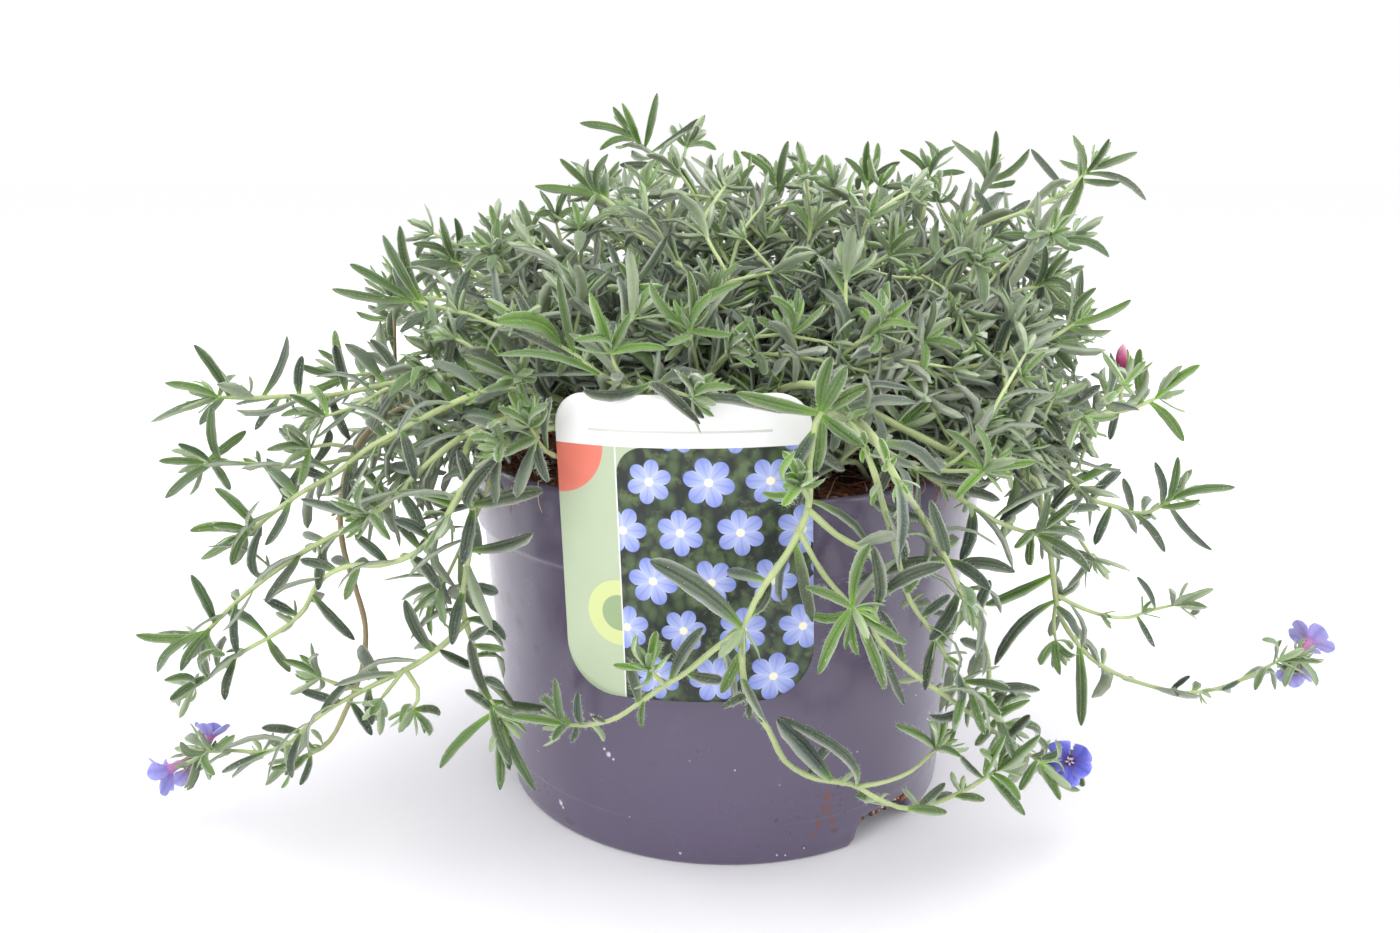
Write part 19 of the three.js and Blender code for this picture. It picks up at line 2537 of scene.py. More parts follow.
{"n": "shoot_back_9", "r": [75, 50], "o": 0, "k": 1, "f": 1, "p": [[-136,348,1160],[-180,356,1171],[-255,356,1186],[-348,350,1142]],
 "l": [157,-275,268,1173,29,4,0,0,-54,79,30,230,-273,490,1167,28,6,0,0,-73,-58,36,303,-219,324,1281,33,9,0,0,-92,26,-28,377,-280,327,1116,33,9,0,0,-57,26,78,450,-275,450,1272,33,5,0,0,-84,-53,-11,523,-279,273,1235,30,3,
0,0,-83,56,-3,597,-313,431,1095,32,8,0,0,-84,-30,45,670,-319,371,1289,36,12,0,0,-85,-8,-51,743,-331,288,1117,27,10,8,0,-80,59,8,817,-366,412,1142,26,4,35,0,-50,-79,-37,890,-390,312,1170,29,9,61,0,-36,41,-84,963,-383,348,
1091,27,5,87,0,-77,-6,63]},
{"n": "shoot_back_1", "r": [75, 50], "o": 0, "k": 1, "f": 1, "p": [[-356,310,1087],[-386,289,1145],[-431,275,1233],[-479,190,1279]],
 "l": [151,-309,316,1237,36,12,0,0,-78,-46,43,214,-434,201,1158,27,3,0,0,-10,41,91,277,-449,416,1234,29,5,0,0,-29,-70,66,340,-339,209,1221,29,4,0,0,-73,17,66,403,-504,310,1208,31,9,0,0,33,-26,91,466,-342,322,1268,36,7,0,
0,-77,-19,61,529,-469,189,1257,32,7,0,0,-19,59,79,591,-509,351,1261,36,10,0,0,-9,-63,77,654,-373,260,1330,33,5,0,0,-80,-47,38,717,-496,135,1184,26,5,0,0,-31,-27,91,780,-549,273,1368,28,12,21,0,-13,-99,7,843,-429,132,
1310,32,5,44,0,-97,-24,4,906,-547,138,1276,29,12,66,0,55,-51,66,969,-488,174,1340,25,13,89,0,-44,-81,-39]},
{"n": "shoot_front_main", "r": [75, 50], "o": 0, "k": 1, "f": 1, "p": [[61,-455,1040],[94,-470,1110],[146,-521,1197],[223,-477,1283]],
 "l": [208,38,-391,1210,26,9,0,0,68,-52,51,267,212,-499,1116,36,3,0,0,-20,-13,97,325,40,-530,1193,34,8,0,0,86,-5,50,384,192,-434,1201,28,7,0,0,-2,-87,49,443,132,-636,1152,35,11,0,0,39,15,91,501,94,-497,1301,35,12,0,0,68,
-73,12,560,244,-513,1179,35,4,0,0,-9,-55,83,619,125,-638,1239,31,8,0,0,69,24,68,677,103,-432,1317,32,8,0,0,81,-27,52,736,284,-467,1201,26,4,6,0,9,5,99,795,200,-552,1317,30,12,27,0,58,79,20,853,190,-382,1310,25,7,48,0,86,
-26,44,912,278,-487,1284,26,10,69,0,-25,68,69,971,234,-461,1357,24,4,90,0,87,40,-28]},
{"n": "shoot_top_front", "r": [75, 50], "o": 0, "k": 1, "f": 1, "p": [[144,-144,1180],[161,-201,1192],[191,-291,1233],[161,-371,1209]],
 "l": [154,83,-254,1259,31,12,0,0,67,-71,-20,222,305,-207,1252,35,7,0,0,-18,-98,0,357,170,-270,1347,31,8,0,0,40,-84,-37,425,287,-273,1184,29,7,0,0,-21,-73,65,492,123,-369,1273,30,11,0,0,93,-29,23,560,266,-254,1336,28,5,
0,0,3,-100,5,628,206,-404,1169,36,9,0,0,10,-44,89,695,131,-375,1306,35,13,0,0,31,-77,-55,763,234,-422,1215,26,9,15,0,-91,-38,-19,831,85,-376,1161,26,8,40,0,35,-93,12,898,143,-429,1250,29,5,64,0,-27,-26,-93,966,159,-443,
1150,23,12,88,0,-78,-35,52]},
{"n": "shoot_front_star_2", "r": [75, 50], "o": 0, "k": 1, "f": 1, "p": [[67,-599,1360],[112,-603,1359],[195,-622,1351],[424,-613,1296]],
 "l": [144,150,-553,1442,35,7,0,0,82,-31,-48,193,195,-587,1235,32,8,0,0,77,-14,62,291,190,-533,1372,34,5,0,0,64,-75,-17,438,229,-547,1267,31,6,0,0,70,-63,33,487,213,-752,1389,34,10,0,0,88,41,-24,584,208,-651,1253,31,8,0,
0,92,-1,39,682,272,-478,1309,34,13,0,0,88,-46,-11,731,283,-732,1296,29,7,4,0,89,45,-7,780,344,-585,1410,26,5,21,0,70,-16,-70,829,371,-588,1245,24,11,39,0,76,-29,58,878,409,-666,1339,27,6,56,0,56,60,-58,927,462,-556,1313,
22,12,74,0,49,-72,-49]},
{"n": "shoot_top_left_2", "r": [75, 50], "o": 0, "k": 1, "f": 1, "p": [[-393,-153,1507],[-476,-134,1469],[-578,-122,1465],[-678,-82,1224]],
 "l": [142,-450,-232,1376,26,7,0,0,-86,47,-19,186,-496,-5,1482,31,4,0,0,-79,-34,-51,230,-543,-222,1534,28,4,0,0,-71,43,-56,274,-487,-92,1328,29,3,0,0,-98,4,20,318,-564,-78,1542,29,8,0,0,-66,-15,-73,362,-564,-259,1438,27,
6,0,0,-85,52,8,406,-555,-29,1461,32,12,0,0,-83,-44,35,494,-672,-156,1423,35,10,0,0,-39,30,87,538,-578,-25,1560,29,10,0,0,-95,-25,-16,582,-664,-220,1510,35,5,0,0,-65,68,-33,626,-594,-49,1352,36,4,0,0,-96,-27,5,670,-687,
-81,1469,31,12,0,0,-7,-5,-100,714,-599,-219,1342,27,8,0,0,-54,61,-57,758,-604,4,1338,32,4,14,0,-52,-47,-71,802,-731,-132,1344,29,12,29,0,26,34,-91,846,-593,-115,1262,25,4,45,0,-84,34,-42,890,-699,-24,1267,27,4,61,0,6,
-50,-87,934,-704,-131,1204,27,12,76,0,9,84,-53,978,-665,-53,1177,25,8,92,0,-84,-46,-30]},
{"n": "shoot_top_mid", "r": [75, 50], "o": 0, "k": 1, "f": 1, "p": [[160,106,1535],[208,143,1532],[281,170,1535],[396,248,1408]],
 "l": [147,190,252,1421,27,8,0,0,88,27,38,203,304,99,1565,35,11,0,0,30,92,-24,258,203,237,1590,29,9,0,0,93,12,-35,312,318,168,1442,28,5,0,0,43,56,71,367,281,116,1674,26,4,0,0,81,52,-27,422,268,269,1533,32,4,0,0,86,-30,
40,477,328,75,1539,30,3,0,0,60,71,37,532,276,230,1695,29,5,0,0,97,10,-23,588,319,224,1410,28,4,0,0,88,15,46,642,384,148,1558,28,10,0,0,24,69,-68,698,278,288,1531,29,5,0,0,79,9,-61,752,342,135,1417,33,9,12,0,55,80,-24,
807,420,255,1512,32,6,31,0,14,15,-98,863,331,268,1391,27,12,51,0,98,0,-20,917,448,220,1393,26,6,71,0,-22,84,-49,973,435,314,1394,23,5,90,0,28,-47,-84]},
{"n": "shoot_left_front", "r": [75, 50], "o": 0, "k": 1, "f": 1, "p": [[-345,-372,1038],[-355,-391,1118],[-352,-425,1253],[-339,-423,1339]],
 "l": [147,-465,-468,1157,33,13,0,0,48,21,85,203,-346,-281,1190,27,10,0,0,-18,-71,68,312,-493,-412,1174,27,4,0,0,43,-19,88,367,-295,-332,1275,33,9,0,0,-40,-77,49,477,-432,-372,1250,28,7,0,0,47,-52,72,532,-265,-413,1290,
27,5,0,0,-67,-36,65,588,-398,-522,1311,29,11,0,0,42,48,77,642,-382,-345,1393,29,3,0,0,30,-82,49,698,-247,-447,1370,32,7,0,0,-72,0,69,752,-350,-496,1360,28,7,12,0,22,75,63,807,-409,-367,1406,24,8,31,0,71,-38,59,863,-264,
-401,1369,26,5,51,0,-58,-14,80,917,-353,-458,1414,25,10,71,0,56,76,33,973,-331,-382,1397,22,7,90,0,12,-84,52]},
{"n": "shoot_centre_right", "r": [75, 50], "o": 0, "k": 1, "f": 1, "p": [[178,-240,1427],[217,-289,1435],[265,-381,1457],[315,-481,1370]],
 "l": [149,328,-223,1454,31,11,0,0,26,-96,2,208,216,-401,1391,32,5,0,0,86,-6,52,267,254,-325,1573,31,6,0,0,50,-76,-42,325,324,-325,1377,28,9,0,0,2,-82,58,384,139,-420,1502,29,12,0,0,84,-52,15,443,324,-338,1534,30,10,0,0,
-9,-98,-16,501,263,-436,1391,29,3,0,0,40,-40,82,560,219,-400,1573,32,4,0,0,59,-78,-19,619,419,-358,1425,27,5,0,0,7,-100,3,677,170,-484,1399,30,3,0,0,76,-63,-19,736,355,-485,1478,26,9,6,0,-5,-40,-92,795,322,-416,1301,33,
8,27,0,21,-98,4,853,278,-567,1383,24,10,48,0,63,11,-77,912,377,-479,1373,26,10,69,0,-40,-62,-67,971,306,-527,1297,23,9,90,0,88,-42,23]},
{"n": "shoot_right_front_2", "r": [75, 50], "o": 0, "k": 1, "f": 1, "p": [[254,-636,1221],[331,-630,1245],[444,-566,1309],[586,-487,1278]],
 "l": [144,387,-673,1165,26,5,0,0,58,20,79,193,344,-691,1383,31,8,0,0,95,21,-23,242,406,-530,1250,35,12,0,0,66,-66,37,340,328,-569,1398,33,4,0,0,99,16,-4,389,433,-548,1213,27,6,0,0,43,1,90,438,415,-676,1346,29,8,0,0,58,
78,22,487,342,-457,1357,30,4,0,0,94,5,35,584,460,-569,1459,33,3,0,0,79,54,-28,633,486,-422,1259,28,10,0,0,84,-14,53,731,491,-446,1395,28,9,4,0,90,15,-41,780,555,-512,1222,30,12,21,0,64,44,64,878,565,-409,1272,25,11,56,0,
93,-31,-19]},
{"n": "shoot_centre_right", "r": [75, 50], "o": 0, "k": 1, "f": 1, "p": [[170,-301,1385],[146,-329,1424],[133,-355,1510],[38,-340,1621]],
 "l": [149,139,-445,1426,35,4,0,0,-63,24,74,208,8,-267,1471,27,9,0,0,-2,-81,59,267,225,-341,1504,31,7,0,0,-73,-44,52,325,59,-454,1447,30,13,0,0,10,12,99,384,101,-309,1534,35,8,0,0,37,-86,36,443,230,-369,1516,33,7,0,0,
-65,-27,71,501,61,-420,1531,30,7,0,0,58,10,81,560,199,-279,1611,31,12,0,0,-43,-70,56,619,55,-456,1542,27,11,0,0,5,38,93]},
{"n": "shoot_back_10", "r": [75, 50], "o": 0, "k": 1, "f": 1, "p": [[241,566,1510],[263,615,1492],[299,686,1482],[396,739,1337]],
 "l": [149,322,664,1585,26,4,0,0,15,66,-74,208,173,725,1416,32,10,0,0,86,50,-6,267,367,611,1470,36,11,0,0,-11,98,-18,325,263,763,1580,32,9,0,0,55,42,-72,384,286,724,1408,31,5,0,0,34,56,75,443,354,657,1571,27,7,0,0,-4,98,
-21,501,211,792,1529,29,7,0,0,89,44,-10,560,410,715,1409,31,12,0,0,-13,93,35,619,385,801,1556,31,11,0,0,25,29,-92,677,260,771,1342,35,11,0,0,96,21,-16,736,422,659,1407,33,8,6,0,-5,75,-66,795,385,806,1403,32,8,27,0,30,
-45,-84,853,335,687,1284,31,12,48,0,81,54,-23,912,469,734,1360,27,7,69,0,-20,26,-94,971,399,779,1301,23,7,90,0,75,-57,-34]},
{"n": "shoot_centre_right", "r": [75, 50], "o": 0, "k": 1, "f": 1, "p": [[137,-160,1109],[117,-198,1149],[72,-241,1214],[36,-330,1220]],
 "l": [154,220,-290,1185,32,9,0,0,-77,-34,54,222,-41,-224,1126,35,11,0,0,11,-61,79,289,132,-203,1283,27,10,0,0,-66,-75,0,425,29,-126,1243,29,13,0,0,-24,-77,59,492,154,-278,1254,31,11,0,0,-83,-14,55,560,-47,-291,1209,34,
5,0,0,19,-20,96,628,32,-232,1352,27,8,0,0,-42,-90,-12,695,122,-362,1207,35,9,0,0,-81,-41,42,763,-48,-275,1209,26,12,15,0,9,-98,18,831,57,-375,1295,25,6,40,0,-53,-54,-65,898,40,-369,1156,29,7,64,0,-41,-61,68,966,-20,-371,
1256,23,12,88,0,32,-77,-55]},
{"n": "shoot_right_front_1", "r": [75, 50], "o": 0, "k": 1, "f": 1, "p": [[253,-468,1135],[293,-474,1161],[374,-444,1211],[463,-421,1217]],
 "l": [154,249,-538,1303,27,8,0,0,99,-9,9,222,381,-337,1169,33,13,0,0,63,-55,56,289,381,-592,1161,26,5,0,0,61,52,60,357,297,-435,1291,30,13,0,0,100,6,-2,425,443,-375,1161,29,12,0,0,25,-22,94,492,387,-557,1281,28,11,0,0,
67,69,27,560,349,-358,1259,30,12,0,0,96,-18,22,628,532,-467,1165,29,12,0,0,26,55,79,695,462,-439,1366,32,5,0,0,83,34,-44,763,505,-319,1181,29,5,15,0,73,-53,43,831,515,-510,1224,27,3,40,0,62,78,-3,898,483,-379,1265,24,12,
64,0,80,-22,-55,966,533,-405,1184,25,8,88,0,35,9,93]},
{"n": "shoot_left_low_1", "r": [75, 50], "o": 0, "k": 1, "f": 1, "p": [[-479,-423,1188],[-475,-431,1214],[-464,-457,1288],[-409,-511,1354]],
 "l": [157,-366,-498,1301,35,9,0,0,-67,4,74,230,-585,-507,1310,31,10,0,0,71,-2,70,303,-418,-343,1313,31,5,0,0,-8,-74,67,377,-444,-584,1274,35,8,0,0,-5,33,94,450,-543,-397,1321,27,7,0,0,47,-57,67,523,-327,-433,1321,34,11,
0,0,-37,-38,85,597,-504,-588,1356,28,4,0,0,52,35,78,670,-472,-417,1392,31,5,0,0,52,-78,35,743,-316,-515,1284,34,4,8,0,-1,-41,91,817,-462,-571,1404,28,5,35,0,98,-3,19,890,-357,-490,1411,23,13,61,0,5,-100,-1,963,-374,-572,
1359,27,11,87,0,23,31,92]},
{"n": "shoot_top_front", "r": [75, 50], "o": 0, "k": 1, "f": 1, "p": [[294,-185,1433],[299,-213,1445],[281,-254,1497],[268,-310,1520]],
 "l": [164,213,-311,1453,30,9,0,0,80,-57,21,252,359,-196,1539,31,4,0,0,-14,-97,18,340,276,-380,1412,28,10,0,0,-9,-19,98,428,237,-189,1569,32,12,0,0,5,-95,32,516,372,-332,1552,30,7,0,0,-78,-16,61,604,170,-299,1496,32,5,0,
0,28,-47,84,780,314,-396,1475,33,11,21,0,-56,-37,74,868,191,-355,1564,29,5,53,0,60,-80,-10,956,290,-362,1567,28,8,84,0,-76,-55,-34]},
{"n": "shoot_top_right_2", "r": [75, 50], "o": 0, "k": 1, "f": 1, "p": [[374,259,1244],[348,320,1263],[281,456,1285],[147,597,1214]],
 "l": [142,235,385,1233,30,10,0,0,41,63,66,186,454,380,1292,29,9,0,0,-74,65,20,230,262,285,1361,34,9,0,0,-12,99,-1,274,323,425,1164,30,12,0,0,-34,52,78,318,394,378,1383,26,12,0,0,-60,78,-19,362,190,349,1271,29,11,0,0,13,
96,24,406,400,444,1246,26,10,0,0,-73,55,41,450,282,412,1390,32,9,0,0,-17,88,-45,494,226,465,1201,33,11,0,0,3,70,72,538,385,491,1351,30,4,0,0,-76,65,-8,582,165,458,1352,30,12,0,0,16,96,-23,626,315,504,1201,27,9,0,0,-67,
66,34,670,252,553,1421,35,6,0,0,-57,61,-55,714,152,479,1221,35,9,0,0,-3,99,10,758,294,636,1243,30,10,14,0,-94,24,-26,802,103,541,1337,30,12,29,0,-26,66,-71,846,179,558,1173,26,10,45,0,-57,67,47,890,156,644,1255,26,5,61,
0,-59,-13,-80,934,101,580,1214,28,6,76,0,21,91,-36,978,147,650,1174,23,13,92,0,-98,0,21]},
{"n": "shoot_centre_right", "r": [75, 50], "o": 0, "k": 1, "f": 1, "p": [[136,-175,1163],[161,-170,1216],[186,-161,1295],[262,-129,1342]],
 "l": [154,94,-169,1318,36,4,0,0,93,6,37,222,249,-94,1248,30,10,0,0,-11,-45,88,289,186,-243,1290,32,4,0,0,28,77,58,357,99,-77,1334,32,8,0,0,67,-35,66,425,289,-165,1297,27,5,0,0,-44,6,90,492,132,-217,1356,27,12,0,0,65,56,
51,560,203,-33,1375,29,10,0,0,25,-63,74,628,272,-210,1357,34,5,0,0,-14,73,67,695,171,-126,1411,31,4,0,0,98,14,13,763,329,-65,1285,26,12,15,0,28,-13,95,831,281,-201,1400,28,3,40,0,63,77,3,898,267,-69,1374,26,4,64,0,92,
-40,1,966,341,-127,1344,21,4,88,0,-10,63,77]},
{"n": "shoot_right_level", "r": [75, 50], "o": 0, "k": 1, "f": 1, "p": [[544,-405,1315],[580,-421,1268],[597,-461,1222],[632,-553,1081]],
 "l": [149,500,-419,1160,31,12,0,0,90,-18,-40,208,648,-498,1294,31,11,0,0,28,17,-94,267,659,-335,1211,31,9,0,0,24,-76,-61,325,517,-529,1155,35,7,0,0,89,-4,-45,384,701,-531,1281,27,10,0,0,-6,-24,-97,443,634,-416,1108,34,
8,0,0,14,-99,-5,501,523,-533,1258,31,12,0,0,50,-40,-77,560,714,-480,1232,32,5,0,0,-25,-60,-76,619,527,-450,1111,32,6,0,0,59,-74,-33,677,618,-577,1253,33,12,0,0,17,-26,-95,736,682,-450,1110,30,10,6,0,-24,-85,-47,795,532,
-572,1100,33,12,27,0,78,-19,-60,853,684,-574,1124,23,4,48,0,-40,-10,-91,971,627,-613,1057,24,10,90,0,42,42,-81]},
{"n": "shoot_top_front", "r": [75, 50], "o": 0, "k": 1, "f": 1, "p": [[184,-175,1157],[197,-233,1174],[165,-296,1222],[179,-411,1306]],
 "l": [149,136,-302,1256,30,11,0,0,72,-64,-26,208,323,-246,1214,35,5,0,0,-29,-95,7,325,193,-229,1293,36,8,0,0,-11,-99,2,384,238,-392,1141,34,6,0,0,-60,-36,72,443,62,-243,1250,31,10,0,0,10,-94,32,501,243,-313,1293,30,9,0,
0,-81,-54,23,560,73,-403,1167,34,4,0,0,-3,-24,97,619,111,-249,1332,35,4,0,0,-6,-96,26,677,247,-384,1273,27,4,0,0,-75,-47,47,736,85,-407,1251,27,12,6,0,60,-44,67,795,197,-325,1384,31,7,27,0,-1,-100,9,853,216,-447,1270,25,
11,48,0,-36,-16,92,912,146,-425,1338,22,12,69,0,82,-56,-4,971,225,-448,1366,21,11,90,0,-66,-75,-7]},
{"n": "shoot_left_top", "r": [75, 50], "o": 0, "k": 1, "f": 1, "p": [[-293,-291,1333],[-295,-333,1383],[-255,-420,1493],[-244,-466,1509]],
 "l": [151,-399,-367,1407,26,4,0,0,61,-45,65,214,-235,-267,1499,30,10,0,0,-27,-87,42,277,-256,-432,1376,34,6,0,0,-20,-3,98,340,-413,-362,1504,33,4,0,0,63,-61,48,403,-178,-311,1471,30,4,0,0,-10,-78,62,466,-283,-506,1456,
31,3,0,0,42,18,89,529,-303,-348,1556,35,12,0,0,45,-79,41,591,-135,-449,1477,29,13,0,0,-21,-50,84,654,-357,-528,1562,27,8,0,0,77,-37,52,717,-156,-405,1634,30,8,0,0,0,-98,18,780,-233,-524,1449,29,8,21,0,17,-52,84,843,-277,
-515,1575,24,6,44,0,51,-71,-49,906,-166,-535,1515,26,5,66,0,-71,-71,-3,969,-279,-551,1501,24,6,89,0,81,-35,47]},
{"n": "shoot_back_9", "r": [75, 50], "o": 0, "k": 1, "f": 1, "p": [[-161,432,1304],[-199,460,1319],[-241,485,1341],[-336,529,1315]],
 "l": [157,-186,522,1391,32,4,0,0,-96,16,-25,230,-306,407,1356,30,12,0,0,-30,94,16,303,-238,583,1292,27,8,0,0,-76,-13,64,377,-210,459,1472,29,13,0,0,-82,58,-2,450,-337,474,1328,33,8,0,0,2,56,83,523,-226,622,1422,34,10,0,
0,-96,-17,22,597,-324,445,1426,32,8,0,0,-49,84,-22,670,-303,558,1201,29,9,0,0,-83,25,49,743,-310,567,1417,33,6,8,0,-78,13,-62,817,-355,453,1305,27,7,35,0,-52,84,-12,890,-355,597,1290,25,9,61,0,-85,-52,2,963,-394,541,
1341,22,10,87,0,-20,39,-90]},
{"n": "shoot_back_11", "r": [75, 50], "o": 0, "k": 1, "f": 1, "p": [[-343,-22,1141],[-348,-7,1199],[-353,23,1302],[-326,54,1352]],
 "l": [154,-220,2,1262,31,12,0,0,-62,21,76,222,-427,-50,1294,36,11,0,0,51,65,56,289,-327,138,1264,27,7,0,0,-19,-42,89,357,-294,-76,1316,33,12,0,0,-37,69,62,425,-477,47,1329,28,5,0,0,65,8,76,492,-248,85,1329,33,10,0,0,
-59,-5,81,560,-405,-63,1368,32,4,0,0,21,71,67,628,-352,144,1368,27,7,0,0,5,-52,85,695,-295,-47,1400,29,9,0,0,-2,78,63,763,-389,111,1387,34,9,15,0,84,-2,54,831,-256,68,1367,31,5,40,0,-48,45,75,898,-337,46,1432,26,7,64,0,
74,68,1,966,-292,131,1395,20,3,88,0,37,-60,72]},
{"n": "shoot_front_star_3", "r": [75, 50], "o": 0, "k": 1, "f": 1, "p": [[207,-452,1135],[238,-461,1202],[315,-458,1299],[330,-410,1397]],
 "l": [149,340,-527,1181,27,9,0,0,-9,10,99,208,151,-503,1282,32,8,0,0,82,6,57,267,308,-377,1282,30,9,0,0,10,-79,60,325,322,-556,1259,33,12,0,0,16,62,77,384,190,-422,1349,29,12,0,0,89,-17,43,443,405,-404,1206,28,7,0,0,27,
-24,93,501,298,-560,1344,34,7,0,0,73,55,41,560,317,-378,1368,29,5,0,0,73,-60,33,619,456,-486,1289,28,10,0,0,1,26,96,677,301,-491,1410,36,8,0,0,69,65,30,736,276,-316,1383,30,10,6,0,53,-21,82,795,408,-426,1389,29,10,27,0,
-54,44,72,853,296,-434,1442,29,11,48,0,54,82,19,912,330,-338,1405,23,12,69,0,5,-37,93,971,365,-422,1468,23,4,90,0,-38,89,25]},
{"n": "shoot_right_fan", "r": [75, 50], "o": 0, "k": 1, "f": 1, "p": [[369,-177,1194],[405,-247,1226],[437,-346,1320],[513,-479,1234]],
 "l": [146,323,-355,1204,27,3,0,0,86,-36,36,198,440,-204,1333,30,5,0,0,32,-95,-3,249,487,-332,1159,30,4,0,0,-1,-47,89,301,338,-308,1321,28,12,0,0,80,-60,9,353,501,-260,1302,27,11,0,0,-35,-86,37,405,367,-422,1247,29,13,0,
0,40,-10,91,456,399,-252,1377,28,7,0,0,30,-91,27,508,540,-383,1312,28,9,0,0,-44,-33,84,560,358,-391,1367,31,8,0,0,84,-33,43,612,530,-313,1453,31,7,0,0,1,-100,10,664,459,-419,1203,35,6,0,0,38,-75,55,715,438,-502,1396,27,
5,0,0,59,-42,-69,767,567,-405,1266,31,8,17,0,-30,-89,-34,819,437,-476,1225,30,11,35,0,94,-31,-12,871,541,-499,1283,31,6,54,0,-8,-17,-98,922,535,-448,1177,27,6,72,0,14,-99,8,974,511,-547,1222,25,10,91,0,74,19,-64]},
{"n": "shoot_top_right_3", "r": [75, 50], "o": 0, "k": 1, "f": 1, "p": [[359,75,1107],[453,74,1134],[583,84,1207],[762,78,1099]],
 "l": [189,451,-56,1182,36,9,0,0,93,35,10,236,464,187,1217,30,7,0,0,93,-36,4,282,545,31,1055,26,9,0,0,60,22,77,328,513,34,1288,36,5,0,0,92,27,-29,375,529,170,1154,29,6,0,0,63,-48,61,421,580,-46,1186,31,11,0,0,53,58,62,
467,479,125,1282,27,9,0,0,97,-10,23,514,681,131,1153,29,10,0,0,23,-15,96,560,558,-10,1291,35,4,0,0,89,42,20,606,628,202,1261,35,12,0,0,84,-53,6,653,652,0,1117,29,11,0,0,85,40,33,699,700,80,1280,33,3,0,0,60,3,-80,745,657,
183,1088,31,6,9,0,90,-42,-9,792,734,-3,1142,28,8,26,0,51,72,-48,838,793,148,1170,31,12,42,0,31,-47,-82,884,735,72,1056,30,9,59,0,92,8,38,931,818,34,1140,22,11,75,0,30,32,-90,977,814,126,1065,25,8,92,0,44,-85,-29]},
{"n": "shoot_top_centre", "r": [75, 50], "o": 0, "k": 1, "f": 1, "p": [[8,-56,1537],[-13,-29,1558],[-35,17,1588],[-67,45,1603]],
 "l": [252,-58,95,1521,34,10,0,0,-36,8,93,428,-160,8,1572,31,5,0,0,17,80,58,516,31,100,1596,34,11,0,0,-80,31,52,604,-83,18,1706,34,9,0,0,-21,96,-16,692,-153,101,1512,34,7,0,0,-20,50,84,780,-43,106,1665,30,12,21,0,-97,18,
-16,868,-160,24,1646,23,11,53,0,-12,99,-5,956,-117,120,1605,28,10,84,0,-58,-43,69]},
{"n": "shoot_back_7", "r": [75, 50], "o": 0, "k": 1, "f": 1, "p": [[824,349,1369],[873,308,1371],[938,244,1394],[976,161,1370]],
 "l": [154,866,239,1476,34,10,0,0,83,-34,-45,222,996,358,1361,30,6,0,0,24,-97,9,289,836,185,1331,34,12,0,0,92,-29,25,357,920,315,1500,32,12,0,0,66,-74,-16,425,1019,252,1307,36,10,0,0,23,-59,77,492,900,139,1484,28,8,0,0,
99,-11,-12,560,1046,312,1464,33,9,0,0,32,-95,2,628,958,153,1343,28,11,0,0,69,-17,70,695,962,164,1495,34,11,0,0,52,-64,-57,763,1079,227,1316,30,7,15,0,4,-100,0,831,912,78,1357,32,4,40,0,93,-29,-22,898,1041,106,1411,25,7,
64,0,-23,-54,-81,966,994,122,1330,24,4,88,0,18,-61,77]},
{"n": "shoot_top_front", "r": [75, 50], "o": 0, "k": 1, "f": 1, "p": [[271,-187,1314],[271,-263,1292],[233,-380,1291],[142,-547,1276]],
 "l": [143,194,-328,1355,35,6,0,0,46,-62,-63,189,404,-302,1305,29,7,0,0,-45,-81,-37,236,156,-274,1174,31,10,0,0,27,-96,3,282,265,-331,1430,28,5,0,0,-7,-85,-52,328,367,-353,1187,28,7,0,0,-53,-82,22,375,152,-323,1311,30,
10,0,0,34,-93,-16,421,344,-369,1383,35,12,0,0,-51,-82,-27,467,207,-403,1171,31,13,0,0,-10,-75,66,514,175,-353,1412,33,8,0,0,-10,-94,-32,560,341,-479,1280,36,10,0,0,-84,-54,8,606,108,-427,1259,33,10,0,0,41,-88,24,653,224,
-467,1380,31,9,0,0,-47,-58,-67,699,229,-483,1204,32,11,0,0,-61,-56,55,745,76,-422,1356,28,5,9,0,-9,-95,-29,792,260,-558,1332,31,9,26,0,-81,-50,-29,838,106,-502,1200,32,4,42,0,-7,-88,48,884,122,-547,1358,29,9,59,0,-24,
-67,-70,931,182,-613,1239,25,6,75,0,-92,-28,26,977,57,-574,1273,27,9,92,0,40,-91,-10]},
{"n": "shoot_right_fan", "r": [75, 50], "o": 0, "k": 1, "f": 1, "p": [[478,-347,1290],[550,-327,1264],[650,-304,1261],[748,-279,1221]],
 "l": [149,588,-218,1331,35,9,0,0,72,-18,-67,208,565,-343,1131,29,6,0,0,90,36,26,267,604,-368,1347,33,4,0,0,77,38,-51,325,572,-210,1244,30,8,0,0,97,-22,-11,384,662,-431,1209,35,11,0,0,76,63,15,443,663,-272,1366,33,4,0,0,
78,-1,-62,501,698,-231,1155,29,9,0,0,78,-14,61,619,694,-198,1303,31,9,0,0,87,-34,-35,677,713,-350,1153,36,8,0,0,83,50,24,736,800,-291,1333,34,5,6,0,48,26,-84,795,734,-213,1188,26,5,27,0,88,-47,4,853,800,-334,1206,27,5,
48,0,32,91,-27,912,817,-217,1255,30,6,69,0,42,-31,-85,971,806,-260,1155,26,7,90,0,71,9,70]},
{"n": "shoot_top_front", "r": [75, 50], "o": 0, "k": 1, "f": 1, "p": [[259,-185,1320],[359,-195,1338],[454,-188,1421],[618,-212,1483]],
 "l": [143,383,-316,1373,33,7,0,0,86,49,-15,189,414,-106,1413,32,12,0,0,76,-58,-28,236,416,-233,1252,30,5,0,0,69,13,72,282,359,-240,1445,33,10,0,0,99,9,-9,328,432,-76,1337,28,11,0,0,73,-46,50,375,475,-326,1373,34,10,0,0,
